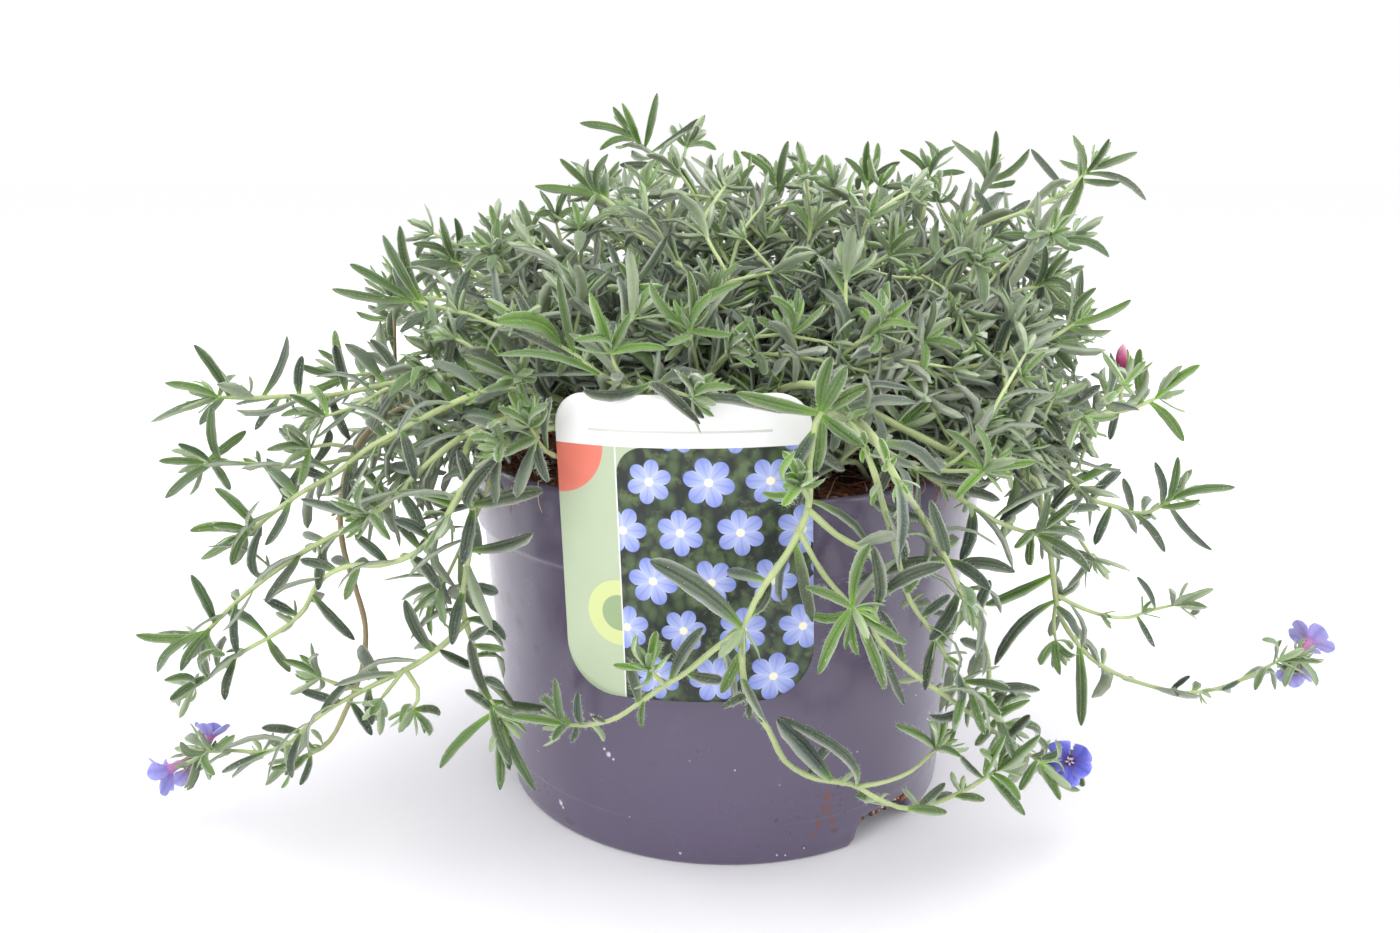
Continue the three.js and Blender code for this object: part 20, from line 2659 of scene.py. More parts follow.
55,57,61,421,336,-142,1493,26,4,0,0,94,-7,34,467,556,-128,1370,29,10,0,0,7,-20,98,514,423,-304,1505,29,11,0,0,74,55,40,560,432,-72,1465,32,3,0,0,76,-40,51,606,532,-235,1414,33,12,0,0,16,49,86,699,560,-104,1394,26,5,0,0,
64,-43,64,745,537,-298,1475,30,7,9,0,84,48,24,792,566,-153,1525,26,4,26,0,78,-57,-25,838,632,-219,1433,26,8,42,0,21,4,98]},
{"n": "shoot_right_level", "r": [75, 50], "o": 0, "k": 1, "f": 1, "p": [[232,-372,1127],[227,-425,1127],[218,-503,1118],[195,-577,1061]],
 "l": [154,151,-436,1204,28,5,0,0,20,-93,-30,222,331,-496,1147,31,7,0,0,-65,-75,-11,357,223,-508,1216,27,7,0,0,-10,-75,-66,560,296,-571,1186,33,6,0,0,-51,-72,-47,695,152,-605,1155,27,4,0,0,17,-48,-86]},
{"n": "shoot_back_5", "r": [75, 50], "o": 0, "k": 1, "f": 1, "p": [[346,655,1193],[346,694,1168],[336,738,1158],[319,796,1099]],
 "l": [160,307,803,1205,32,12,0,0,29,27,-92,320,445,780,1232,30,7,0,0,-32,77,-56,400,186,754,1198,36,12,0,0,26,94,-23,480,416,811,1066,35,7,0,0,-56,76,34,560,327,793,1262,31,4,0,0,-23,78,-58,720,436,870,1099,29,9,0,0,
-73,36,-59,800,224,840,1144,26,10,29,0,26,42,-87,880,330,791,1010,27,6,57,0,-39,91,12,960,328,894,1090,28,4,86,0,-38,-11,-92]},
{"n": "shoot_right_fan", "r": [75, 50], "o": 0, "k": 1, "f": 1, "p": [[341,-137,1074],[363,-170,1087],[399,-219,1099],[441,-284,1074]],
 "l": [160,278,-241,1183,29,12,0,0,80,-59,6,240,489,-179,1149,33,4,0,0,-14,-99,-1,400,372,-203,1257,29,4,0,0,62,-77,-12,480,494,-198,1050,29,13,0,0,14,-84,52,560,357,-312,1124,33,11,0,0,97,-25,5,640,492,-225,1180,27,9,0,
0,23,-89,-39,800,410,-333,1149,25,7,29,0,59,-46,-66,880,511,-297,1057,26,3,57,0,-45,-86,-23]},
{"n": "shoot_left_top", "r": [75, 50], "o": 0, "k": 1, "f": 1, "p": [[-226,-221,1203],[-233,-320,1236],[-297,-426,1331],[-310,-570,1355]],
 "l": [143,-280,-311,1372,29,8,0,0,20,-96,-22,189,-110,-351,1202,36,8,0,0,-46,-80,37,236,-339,-353,1226,29,6,0,0,46,-80,39,282,-173,-338,1378,26,8,0,0,-38,-92,-6,328,-252,-481,1203,36,9,0,0,-27,-16,95,375,-343,-282,1364,
27,11,0,0,-11,-94,31,421,-181,-455,1343,28,11,0,0,-89,-24,38,467,-407,-432,1297,30,10,0,0,34,-42,84,514,-265,-360,1417,28,11,0,0,-58,-81,10,560,-276,-544,1314,32,5,0,0,-61,4,79,606,-397,-418,1378,31,6,0,0,29,-90,32,653,
-215,-471,1446,31,9,0,0,-62,-78,9,699,-338,-537,1262,35,11,0,0,-7,-58,81,745,-381,-485,1469,27,7,9,0,10,-98,-15,792,-240,-567,1357,26,12,26,0,-81,-58,11,838,-380,-613,1334,31,10,42,0,78,-53,34,884,-297,-588,1409,26,7,59,
0,-20,-66,-73,931,-289,-636,1327,28,5,75,0,-53,-31,79,977,-347,-614,1383,25,12,92,0,66,-65,-37]},
{"n": "shoot_top_fan", "r": [75, 50], "o": 0, "k": 1, "f": 1, "p": [[-19,-328,1237],[81,-334,1243],[200,-304,1261],[380,-240,1209]],
 "l": [186,131,-314,1382,28,11,0,0,83,-19,-53,230,123,-281,1159,30,5,0,0,80,-34,50,274,124,-477,1313,35,5,0,0,93,36,-9,318,112,-215,1317,27,3,0,0,97,-24,-9,362,195,-355,1191,28,5,0,0,48,42,77,406,178,-347,1368,30,7,0,0,
82,35,-45,450,175,-187,1223,30,4,0,0,88,-27,39,494,259,-431,1263,27,7,0,0,62,74,25,538,176,-262,1352,36,6,0,0,96,2,-29,582,265,-266,1178,32,11,0,0,62,4,78,626,257,-365,1334,36,7,0,0,75,58,-32,670,211,-188,1277,34,11,0,0,
98,-5,-19,714,325,-355,1167,30,6,0,0,64,73,26,758,330,-258,1333,29,11,14,0,63,21,-75,802,315,-199,1168,27,9,29,0,92,-26,28,846,398,-316,1234,26,7,45,0,35,85,-38,890,397,-168,1258,22,5,61,0,64,-32,-69,934,412,-245,1132,
28,7,76,0,69,44,58,978,442,-243,1242,25,9,92,0,32,47,-82]},
{"n": "shoot_centre_right", "r": [75, 50], "o": 0, "k": 1, "f": 1, "p": [[135,-191,1217],[185,-180,1238],[251,-136,1270],[386,-104,1221]],
 "l": [151,236,-296,1292,31,10,0,0,75,64,16,214,214,-79,1341,27,7,0,0,94,-33,-9,277,283,-177,1183,32,6,0,0,39,33,86,340,239,-198,1359,32,12,0,0,72,67,-21,403,198,-63,1264,33,9,0,0,84,-10,54,466,320,-178,1275,30,7,0,0,0,
84,54,529,220,-90,1418,33,13,0,0,90,41,-18,591,303,-41,1149,32,5,0,0,72,25,65,654,320,-197,1330,28,5,0,0,73,63,-27,717,348,15,1283,31,9,0,0,82,-40,-41,780,359,-152,1189,26,5,21,0,64,69,35,843,445,-103,1306,26,12,44,0,39,
16,-91,906,391,-52,1181,30,12,66,0,85,-50,14,969,464,-145,1206,23,12,89,0,30,90,-33]},
{"n": "shoot_top_right_2", "r": [75, 50], "o": 0, "k": 1, "f": 1, "p": [[381,256,1252],[435,265,1350],[494,295,1527],[547,337,1620]],
 "l": [142,344,321,1398,31,5,0,0,82,-17,55,186,536,290,1317,26,8,0,0,-10,-9,99,230,422,208,1414,29,11,0,0,68,66,32,274,440,366,1427,31,12,0,0,52,-63,58,318,569,205,1381,28,9,0,0,-8,38,92,362,396,256,1464,30,12,0,0,87,27,
41,406,523,384,1438,32,12,0,0,0,-42,91,450,503,186,1495,33,8,0,0,9,72,69,494,413,339,1555,28,7,0,0,83,-26,49,538,592,316,1509,28,5,0,0,-36,-1,93,582,456,220,1601,28,13,0,0,56,66,49,626,481,403,1562,29,11,0,0,43,-36,82,
670,614,238,1569,34,4,0,0,-4,51,86,714,465,314,1672,34,8,0,0,92,32,23,758,592,417,1579,34,11,14,0,8,-23,97,802,580,271,1678,28,8,29,0,17,95,25,846,489,392,1651,24,7,45,0,89,-2,46,890,619,355,1629,26,10,61,0,-45,30,84,
934,552,334,1688,25,12,76,0,67,72,-16,978,566,401,1650,23,8,92,0,44,-54,72]},
{"n": "shoot_top_right_3", "r": [75, 50], "o": 0, "k": 1, "f": 1, "p": [[662,80,1526],[744,50,1523],[843,-37,1537],[990,-108,1376]],
 "l": [142,752,28,1389,30,4,0,0,90,-13,41,186,754,-8,1627,26,6,0,0,90,-5,-44,230,841,183,1499,30,6,0,0,70,-71,3,274,775,-54,1496,35,8,0,0,92,33,23,318,822,52,1658,33,6,0,0,68,-60,-42,362,851,32,1434,32,10,0,0,47,-64,61,
406,750,-55,1594,31,4,0,0,98,-21,-7,450,887,35,1600,34,11,0,0,13,-99,-4,494,820,-122,1467,26,11,0,0,69,-21,69,582,923,-9,1508,30,9,0,0,17,-93,33,626,811,-184,1527,31,8,0,0,98,-9,-19,714,872,-49,1390,30,7,0,0,85,-52,7,
758,925,-150,1528,31,8,14,0,52,5,-85,802,992,-19,1427,32,6,29,0,9,-84,-54,890,1056,-126,1420,24,5,61,0,-15,-3,-99,934,979,-65,1340,27,9,76,0,62,-77,-15,978,1011,-175,1354,27,9,92,0,54,53,-65]},
{"n": "shoot_front_star_3", "r": [75, 50], "o": 0, "k": 1, "f": 1, "p": [[225,-500,1189],[268,-519,1204],[344,-534,1229],[419,-556,1193]],
 "l": [157,347,-479,1332,28,13,0,0,61,-74,-30,303,256,-596,1302,30,12,0,0,100,-7,1,377,379,-446,1253,35,4,0,0,52,-83,20,450,393,-628,1207,28,5,0,0,57,51,64,523,350,-520,1367,28,5,0,0,94,-23,-25,597,444,-460,1140,32,5,0,
0,70,-45,56,743,493,-470,1266,28,11,8,0,51,-62,-60,890,475,-602,1229,27,3,61,0,35,16,-92,963,475,-537,1159,21,7,87,0,20,-98,-9]},
{"n": "shoot_back_6", "r": [75, 50], "o": 0, "k": 1, "f": 1, "p": [[487,481,1227],[525,502,1319],[577,524,1466],[563,480,1631]],
 "l": [142,434,580,1383,35,6,0,0,81,-14,56,186,642,520,1290,34,6,0,0,-14,14,98,230,483,432,1431,31,13,0,0,65,63,41,274,533,645,1355,32,5,0,0,36,-37,86,318,631,419,1383,28,3,0,0,-7,59,80,362,461,529,1443,36,9,0,0,87,9,49,
406,646,590,1388,29,5,0,0,-18,-25,95,450,574,439,1499,31,7,0,0,38,84,38,494,521,617,1460,27,11,0,0,63,-33,70,538,700,482,1436,30,10,0,0,-13,30,95,582,527,507,1532,32,11,0,0,87,31,38,626,644,595,1501,32,8,0,0,-21,-45,87,
670,511,446,1535,27,11,0,0,48,31,82,714,673,619,1577,27,13,0,0,-27,-49,83,758,539,410,1608,31,6,14,0,27,60,75,802,542,581,1661,33,9,29,0,8,-87,49,846,625,433,1643,26,5,45,0,-74,25,63,890,492,469,1651,24,4,61,0,71,-17,68,
934,591,503,1705,25,6,76,0,-60,-77,23,978,561,433,1674,27,12,92,0,-14,72,68]},
{"n": "shoot_top_mid", "r": [75, 50], "o": 0, "k": 1, "f": 1, "p": [[119,114,1338],[157,69,1366],[228,5,1423],[282,-82,1381]],
 "l": [151,282,104,1434,31,11,0,0,1,-100,9,214,183,-79,1329,28,13,0,0,61,4,79,277,143,60,1518,35,8,0,0,71,-70,-5,340,299,41,1378,30,3,0,0,-19,-70,69,403,164,-55,1437,27,6,0,0,91,15,38,466,246,70,1504,35,3,0,0,39,-92,-2,
529,299,-59,1361,32,11,0,0,25,-18,95,591,188,-38,1519,36,12,0,0,91,-42,-2,654,337,44,1429,29,10,0,0,31,-94,12,717,150,-126,1333,33,3,0,0,81,-58,-3,780,323,-106,1485,28,9,21,0,19,-51,-84,843,329,-71,1299,30,11,44,0,1,-96,
29,906,261,-152,1381,28,3,66,0,79,5,-61,969,364,-119,1383,25,10,89,0,-36,-66,-67]},
{"n": "shoot_top_mid", "r": [75, 50], "o": 0, "k": 1, "f": 1, "p": [[115,235,1629],[152,283,1620],[223,346,1630],[340,376,1547]],
 "l": [149,273,218,1604,33,9,0,0,23,96,-19,208,131,387,1728,32,7,0,0,69,49,-54,267,171,321,1517,29,9,0,0,62,63,47,325,241,266,1703,31,6,0,0,42,86,-30,384,122,424,1654,29,13,0,0,96,26,10,443,296,330,1598,27,10,0,0,-4,81,
59,501,221,367,1774,30,4,0,0,68,62,-40,560,198,425,1563,35,4,0,0,84,30,45,619,331,298,1656,31,5,0,0,35,89,-28,677,298,499,1673,33,7,0,0,75,-17,-64,736,291,333,1466,34,8,6,0,86,47,20,795,367,339,1652,25,11,27,0,45,30,-84,
853,308,479,1524,25,5,48,0,83,-39,-41,912,365,329,1519,29,7,69,0,42,88,-21,971,416,413,1552,21,11,90,0,9,-27,-96]},
{"n": "shoot_top_fan", "r": [75, 50], "o": 0, "k": 1, "f": 1, "p": [[-54,-289,1208],[-3,-310,1257],[55,-349,1365],[164,-330,1370]],
 "l": [149,16,-431,1248,36,4,0,0,70,34,63,208,2,-267,1381,35,8,0,0,82,-58,0,267,127,-326,1239,35,5,0,0,-1,-25,97,325,-48,-387,1345,33,5,0,0,88,4,47,384,99,-245,1386,34,6,0,0,0,-85,52,443,53,-452,1327,27,10,0,0,21,32,93,
501,-30,-308,1462,36,5,0,0,75,-56,36,560,162,-339,1408,29,11,0,0,-42,-50,76,619,72,-435,1422,29,13,0,0,68,57,46,677,110,-293,1486,31,5,0,0,85,-52,-12,736,200,-337,1261,33,11,6,0,66,9,75,795,173,-409,1478,32,7,27,0,82,44,
-36,853,172,-237,1371,30,9,48,0,87,-49,-11,912,228,-374,1333,26,11,69,0,46,84,30,971,209,-313,1413,27,6,90,0,62,0,-79]},
{"n": "shoot_top_left_2", "r": [75, 50], "o": 0, "k": 1, "f": 1, "p": [[-185,-36,1182],[-162,-94,1216],[-128,-167,1269],[-66,-273,1258]],
 "l": [149,-269,-117,1319,26,12,0,0,64,-76,14,208,-57,-85,1255,34,7,0,0,-24,-93,29,267,-212,-237,1178,30,9,0,0,60,-31,74,325,-156,-106,1326,30,7,0,0,39,-91,-13,384,-28,-177,1208,31,11,0,0,-20,-54,82,443,-244,-186,1287,
35,7,0,0,69,-50,52,501,-79,-126,1341,33,8,0,0,-10,-99,10,560,-104,-280,1201,35,5,0,0,27,-30,91,619,-168,-217,1399,26,13,0,0,67,-72,-16,677,36,-178,1264,35,5,0,0,-4,-98,21,736,-175,-330,1227,35,9,6,0,89,-42,17,795,-41,
-266,1339,30,11,27,0,15,-67,-73,853,-29,-287,1204,23,6,48,0,-3,-73,68,912,-88,-336,1286,28,11,69,0,83,-19,-53,971,-11,-296,1270,21,6,90,0,-36,-82,-45]},
{"n": "shoot_top_left", "r": [75, 50], "o": 0, "k": 1, "f": 1, "p": [[-124,123,1292],[-116,159,1316],[-110,217,1364],[-76,338,1330]],
 "l": [154,-39,230,1262,28,9,0,0,-19,53,83,222,-96,130,1439,27,12,0,0,11,99,10,289,-188,239,1306,35,8,0,0,53,48,70,357,18,229,1388,31,4,0,0,-58,60,55,425,-183,144,1440,30,7,0,0,33,85,41,492,-116,298,1352,32,12,0,0,4,-9,
100,560,-28,184,1478,27,5,0,0,-25,93,25,628,-216,299,1400,34,11,0,0,69,69,22,695,-12,279,1307,35,12,0,0,-31,90,31,763,-80,373,1452,33,5,15,0,22,55,-80,831,-132,323,1280,28,9,40,0,64,75,20,898,19,357,1347,28,10,64,0,-41,
79,-46,966,-101,415,1349,25,8,88,0,70,28,-66]},
{"n": "shoot_back_4", "r": [75, 50], "o": 0, "k": 1, "f": 1, "p": [[89,625,1223],[140,628,1297],[199,604,1436],[315,490,1536]],
 "l": [142,189,778,1284,32,5,0,0,45,-41,79,186,184,563,1319,27,5,0,0,22,77,61,230,67,697,1409,26,11,0,0,87,-21,45,274,278,644,1314,29,8,0,0,-21,-13,97,318,74,527,1399,26,9,0,0,72,24,65,362,189,716,1410,27,11,0,0,26,-79,
56,406,250,538,1408,32,11,0,0,-19,56,81,450,95,636,1489,34,9,0,0,90,-16,40,494,274,661,1432,34,13,0,0,-38,-42,82,538,154,514,1484,29,10,0,0,61,49,62,582,190,702,1492,34,4,0,0,41,-69,60,626,284,525,1444,30,3,0,0,-6,20,98,
670,155,573,1549,34,7,0,0,89,-37,26,714,342,630,1489,28,6,0,0,6,-81,59,758,240,422,1497,33,8,14,0,78,18,59,802,296,546,1605,29,5,29,0,49,-81,-32,846,369,494,1458,32,12,45,0,4,-47,88,890,282,468,1560,26,12,61,0,99,-3,-16,
934,370,503,1580,23,11,76,0,-7,-99,-9,978,351,418,1541,25,5,92,0,40,35,85]},
{"n": "shoot_top_left", "r": [75, 50], "o": 0, "k": 1, "f": 1, "p": [[-135,89,1393],[-109,61,1448],[-75,12,1530],[8,-24,1569]],
 "l": [151,-97,123,1568,32,8,0,0,42,-89,19,214,-15,-4,1445,28,7,0,0,-19,-3,98,277,-171,16,1548,29,10,0,0,90,-24,35,340,10,89,1560,33,4,0,0,-26,-83,49,403,-121,-58,1470,26,11,0,0,37,-1,93,466,-120,76,1638,35,11,0,0,46,
-86,24,529,29,-12,1513,36,7,0,0,-24,-36,90,591,-160,-100,1605,26,7,0,0,82,-6,57,654,-25,105,1649,31,9,0,0,50,-78,38,717,43,-70,1493,31,8,0,0,35,-7,94]},
{"n": "shoot_left_ridge", "r": [75, 50], "o": 0, "k": 1, "f": 1, "p": [[-102,-510,1187],[-129,-525,1235],[-169,-545,1310],[-245,-493,1391]],
 "l": [151,-92,-451,1366,27,9,0,0,-69,-63,35,277,-211,-477,1282,30,4,0,0,8,-71,70,340,-77,-545,1333,27,7,0,0,-88,-20,44,403,-213,-623,1291,28,13,0,0,11,33,94,466,-184,-471,1359,30,11,0,0,-24,-85,47,529,-91,-665,1357,32,
4,0,0,-71,11,70,591,-270,-509,1335,31,12,0,0,18,-46,87,654,-124,-552,1438,26,9,0,0,-93,19,31,717,-305,-562,1322,35,8,0,0,-9,52,85,780,-160,-399,1408,26,10,21,0,-87,-5,49,843,-263,-553,1446,29,7,44,0,-39,92,8,906,-290,
-444,1369,23,13,66,0,-8,-10,99,969,-242,-471,1444,25,10,89,0,-96,21,-16]},
{"n": "shoot_right_drop", "r": [75, 50], "o": 0, "k": 1, "f": 1, "p": [[440,-304,1107],[462,-344,1108],[485,-388,1111],[509,-461,1079]],
 "l": [160,402,-406,1181,30,12,0,0,72,-65,-26,240,615,-325,1147,29,12,0,0,7,-99,-8,400,495,-407,1213,36,6,0,0,45,-73,-51,480,597,-410,1060,30,4,0,0,-10,-84,54,560,412,-486,1138,28,4,0,0,86,-50,-6,800,476,-551,1158,27,3,
29,0,45,-40,-80,880,583,-495,1053,25,7,57,0,-64,-74,-21]},
{"n": "shoot_back_9", "r": [75, 50], "o": 0, "k": 1, "f": 1, "p": [[-318,559,1552],[-392,589,1524],[-486,658,1499],[-564,713,1333]],
 "l": [144,-425,678,1631,34,6,0,0,-76,2,-65,193,-496,507,1493,35,8,0,0,-37,90,-22,242,-357,693,1466,36,7,0,0,-99,3,-14,340,-443,555,1417,33,12,0,0,-74,66,13,389,-401,714,1571,28,5,0,0,-95,16,-27,438,-530,578,1568,33,9,0,
0,-37,89,-29,487,-444,714,1397,32,3,0,0,-86,36,35,536,-489,702,1640,29,4,0,0,-74,45,-51,584,-603,620,1435,36,9,0,0,-17,98,4,633,-453,808,1446,30,10,0,0,-90,-3,-43,682,-626,675,1522,34,9,0,0,-14,42,-90,731,-458,619,1343,
29,9,4,0,-70,56,-44,780,-562,799,1407,33,11,21,0,-24,-42,-88,829,-628,639,1337,32,6,39,0,23,74,-64,878,-479,738,1306,23,12,56,0,-86,1,-52,927,-622,749,1339,27,9,74,0,31,-16,-94,976,-574,689,1285,27,4,91,0,-34,91,-22]},
{"n": "shoot_centre_right", "r": [75, 50], "o": 0, "k": 1, "f": 1, "p": [[166,-249,1402],[218,-253,1414],[290,-243,1455],[397,-173,1442]],
 "l": [151,249,-275,1548,30,12,0,0,92,-2,-39,214,317,-146,1359,29,7,0,0,69,-54,48,277,296,-343,1448,29,6,0,0,68,72,14,340,234,-176,1525,28,3,0,0,96,-27,5,403,354,-257,1359,29,8,0,0,46,1,89,466,226,-345,1567,27,10,0,0,92,
25,29,529,335,-124,1503,29,7,0,0,68,-61,40,591,399,-309,1446,29,5,0,0,34,72,61,654,303,-208,1613,27,3,0,0,93,33,-17,717,346,-133,1361,29,6,0,0,87,9,48,780,452,-267,1495,32,10,21,0,39,87,-31,843,383,-88,1491,31,10,44,0,
86,-11,-50,906,446,-167,1387,30,6,66,0,28,67,69,969,448,-153,1476,22,13,89,0,24,46,-86]},
{"n": "shoot_front_star_2", "r": [75, 50], "o": 0, "k": 1, "f": 1, "p": [[170,-543,1252],[244,-572,1293],[347,-617,1351],[537,-613,1328]],
 "l": [236,349,-586,1257,33,7,0,0,11,-32,94,282,252,-676,1399,32,8,0,0,99,17,-2,328,352,-509,1372,35,9,0,0,42,-90,13,375,317,-685,1276,31,3,0,0,57,14,81,421,247,-589,1475,36,5,0,0,88,-46,9,467,415,-584,1334,36,11,0,0,-4,
-69,72,514,268,-749,1375,34,12,0,0,89,0,45,560,338,-546,1425,36,10,0,0,77,-62,14,699,461,-537,1357,29,3,0,0,63,-77,2,745,466,-702,1307,27,10,9,0,76,61,24,838,501,-558,1246,27,12,42,0,88,-29,38]},
{"n": "shoot_front_star_1", "r": [75, 50], "o": 0, "k": 1, "f": 1, "p": [[-79,-553,1157],[-19,-592,1171],[93,-603,1234],[274,-616,1281]],
 "l": [189,24,-541,1251,29,12,0,0,59,-79,-17,282,-27,-652,1262,35,10,0,0,98,-15,-15,328,121,-508,1217,30,4,0,0,42,-86,28,421,37,-575,1345,31,12,0,0,95,-27,-16,467,138,-550,1160,26,7,0,0,39,-35,86,560,79,-511,1288,31,10,
0,0,85,-47,23,653,118,-634,1349,31,5,0,0,97,9,-23,699,208,-522,1235,27,8,0,0,58,-67,46,792,187,-568,1336,29,3,26,0,93,-31,-20,838,294,-603,1204,24,8,42,0,44,-17,88,884,273,-679,1347,26,7,59,0,84,43,-32,931,314,-561,1305,
22,6,75,0,57,-82,-6,977,343,-664,1265,24,10,92,0,46,63,63]},
{"n": "shoot_top_mid", "r": [75, 50], "o": 0, "k": 1, "f": 1, "p": [[45,214,1046],[66,146,1126],[85,65,1264],[123,-99,1291]],
 "l": [142,182,110,1114,27,5,0,0,-48,-45,75,186,-33,101,1126,29,5,0,0,63,-40,66,230,123,201,1232,35,3,0,0,-8,-96,27,274,112,15,1126,32,8,0,0,-8,9,99,318,-4,132,1253,29,8,0,0,69,-68,27,362,160,127,1207,29,9,0,0,-54,-57,
62,406,33,34,1224,27,13,0,0,56,33,76,450,64,196,1278,30,9,0,0,15,-80,58,494,194,-1,1229,34,11,0,0,-32,-6,95,538,7,64,1301,30,13,0,0,80,-32,51,582,172,114,1360,30,4,0,0,-36,-84,42,626,83,-37,1258,29,8,0,0,21,5,98,670,28,
66,1403,27,8,0,0,37,-91,17,714,228,1,1269,31,13,0,0,-27,-86,43,758,-6,-83,1267,32,12,14,0,68,-67,30,802,150,-33,1386,26,12,29,0,2,-94,-35,846,142,-80,1224,25,4,45,0,-7,-72,69,890,64,-111,1336,28,9,61,0,65,-68,-34,934,
193,-127,1318,27,13,76,0,-54,-81,-23,978,101,-182,1258,22,4,92,0,66,-35,66]},
{"n": "shoot_back_9", "r": [75, 50], "o": 0, "k": 1, "f": 1, "p": [[-143,373,1206],[-133,391,1246],[-122,416,1325],[-86,432,1349]],
 "l": [160,-110,311,1308,32,11,0,0,13,78,61,240,-213,497,1330,27,10,0,0,72,-10,68,320,-8,433,1334,27,5,0,0,-62,21,76,400,-183,327,1364,28,13,0,0,36,69,63,480,-151,557,1330,32,7,0,0,18,-27,94,560,-20,338,1418,27,5,0,0,
-30,67,68,640,-192,487,1444,33,6,0,0,87,-1,49,720,26,453,1360,27,5,0,0,-25,30,92,800,-49,424,1464,29,9,29,0,76,53,-37,880,-53,499,1348,24,12,57,0,72,-50,49,960,-27,416,1371,22,12,86,0,12,96,24]},
{"n": "shoot_top_mid", "r": [75, 50], "o": 0, "k": 1, "f": 1, "p": [[92,153,1260],[129,89,1339],[186,-7,1512],[230,-95,1525]],
 "l": [143,26,44,1404,35,8,0,0,86,-40,32,189,196,149,1372,31,9,0,0,-6,-90,44,236,137,5,1337,28,13,0,0,31,30,90,282,68,128,1480,27,4,0,0,57,-75,33,328,287,45,1393,29,8,0,0,-41,-46,79,375,93,-2,1421,29,9,0,0,78,9,62,421,
179,139,1496,30,5,0,0,14,-85,50,467,228,-58,1410,29,8,0,0,-3,-2,100,514,70,24,1553,31,9,0,0,73,-45,51,560,276,34,1553,27,12,0,0,-40,-72,57,606,151,-124,1512,33,10,0,0,49,6,87,653,192,-1,1642,34,8,0,0,43,-90,-1,699,313,
-97,1512,26,13,0,0,-26,-48,83,745,128,-130,1583,25,7,9,0,85,-52,11,792,311,-85,1598,29,9,26,0,-13,-92,-38,838,234,-162,1445,31,7,42,0,52,-44,73,884,218,-140,1588,25,8,59,0,52,-52,-67,931,293,-117,1510,22,5,75,0,-47,-88,
7,977,230,-169,1524,24,5,92,0,99,5,10]},
{"n": "shoot_right_drop", "r": [75, 50], "o": 0, "k": 1, "f": 1, "p": [[723,-437,1085],[750,-452,1103],[784,-495,1152],[815,-517,1240]],
 "l": [157,805,-373,1192,29,8,0,0,66,-75,6,303,704,-473,1203,29,9,0,0,84,-48,25,377,867,-452,1135,28,7,0,0,-10,-81,57,450,707,-600,1122,27,12,0,0,72,-26,65,523,792,-427,1261,36,7,0,0,43,-87,25]},
{"n": "shoot_top_front", "r": [75, 50], "o": 0, "k": 1, "f": 1, "p": [[267,-186,1316],[363,-207,1256],[481,-257,1242],[605,-264,1094]],
 "l": [142,353,-117,1198,27,8,0,0,74,-65,-18,186,358,-296,1250,27,6,0,0,76,44,-48,230,418,-144,1325,29,10,0,0,64,-34,-69,274,333,-204,1094,29,7,0,0,97,-24,-6,318,451,-302,1312,31,8,0,0,64,19,-75,362,491,-130,1241,29,12,
0,0,54,-83,-17,406,404,-345,1191,27,4,0,0,97,2,23,450,455,-227,1363,34,10,0,0,79,-47,-39,494,535,-229,1187,31,9,0,0,38,-67,64,538,449,-366,1303,35,6,0,0,98,3,-21,582,564,-199,1301,36,9,0,0,49,-76,-42,626,516,-323,1111,
36,3,0,0,94,0,34,670,619,-332,1297,27,8,0,0,42,8,-90,714,570,-158,1123,36,9,0,0,59,-74,-31,758,536,-399,1138,27,7,14,0,68,42,-60,802,646,-214,1196,32,12,29,0,15,-27,-95,846,527,-247,1070,28,3,45,0,96,-14,-22,890,635,
-307,1118,22,13,61,0,-1,55,-83,934,628,-219,1080,26,11,76,0,19,-80,-57]},
{"n": "shoot_back_6", "r": [75, 50], "o": 0, "k": 1, "f": 1, "p": [[465,460,1216],[482,513,1205],[508,569,1191],[490,669,1131]],
 "l": [154,413,601,1261,29,5,0,0,68,55,-49,222,527,527,1101,31,9,0,0,10,94,33,289,561,594,1309,31,6,0,0,5,73,-68,357,382,638,1150,35,8,0,0,77,63,-4,425,614,516,1173,27,11,0,0,9,100,-2,492,514,667,1306,26,10,0,0,60,45,
-66,628,622,659,1231,30,3,0,0,-35,66,-67,695,374,679,1176,29,12,0,0,54,66,-52,763,566,627,1087,27,12,15,0,-53,84,-5,831,477,753,1194,26,12,40,0,-9,20,-98,898,440,666,1084,25,13,64,0,41,91,5,966,519,717,1117,24,8,88,0,
-86,24,-44]},
{"n": "shoot_top_left", "r": [75, 50], "o": 0, "k": 1, "f": 1, "p": [[-111,160,1158],[-146,183,1255],[-221,257,1428],[-273,302,1487]],
 "l": [143,-195,282,1289,35,12,0,0,5,-61,79,189,-56,133,1303,35,7,0,0,-66,38,65,236,-287,154,1252,35,5,0,0,15,34,93,282,-83,291,1313,36,11,0,0,-65,-18,74,328,-184,110,1388,27,5,0,0,-25,88,40,375,-252,300,1323,28,6,0,0,
17,-27,95,421,-113,228,1437,28,5,0,0,-91,31,26,467,-323,142,1383,27,7,0,0,4,60,80,514,-178,378,1409,29,13,0,0,-50,-28,82,560,-167,149,1525,36,10,0,0,-52,69,50,606,-348,298,1409,32,11,0,0,13,23,96,653,-170,344,1540,26,6,
0,0,-92,-1,38,699,-299,202,1527,29,9,0,0,-17,87,46,745,-317,406,1482,29,12,9,0,-21,-34,92,792,-218,284,1553,28,6,26,0,-83,53,16,838,-354,294,1497,24,9,42,0,27,77,58,884,-260,375,1504,29,6,59,0,-89,-20,41,931,-313,290,
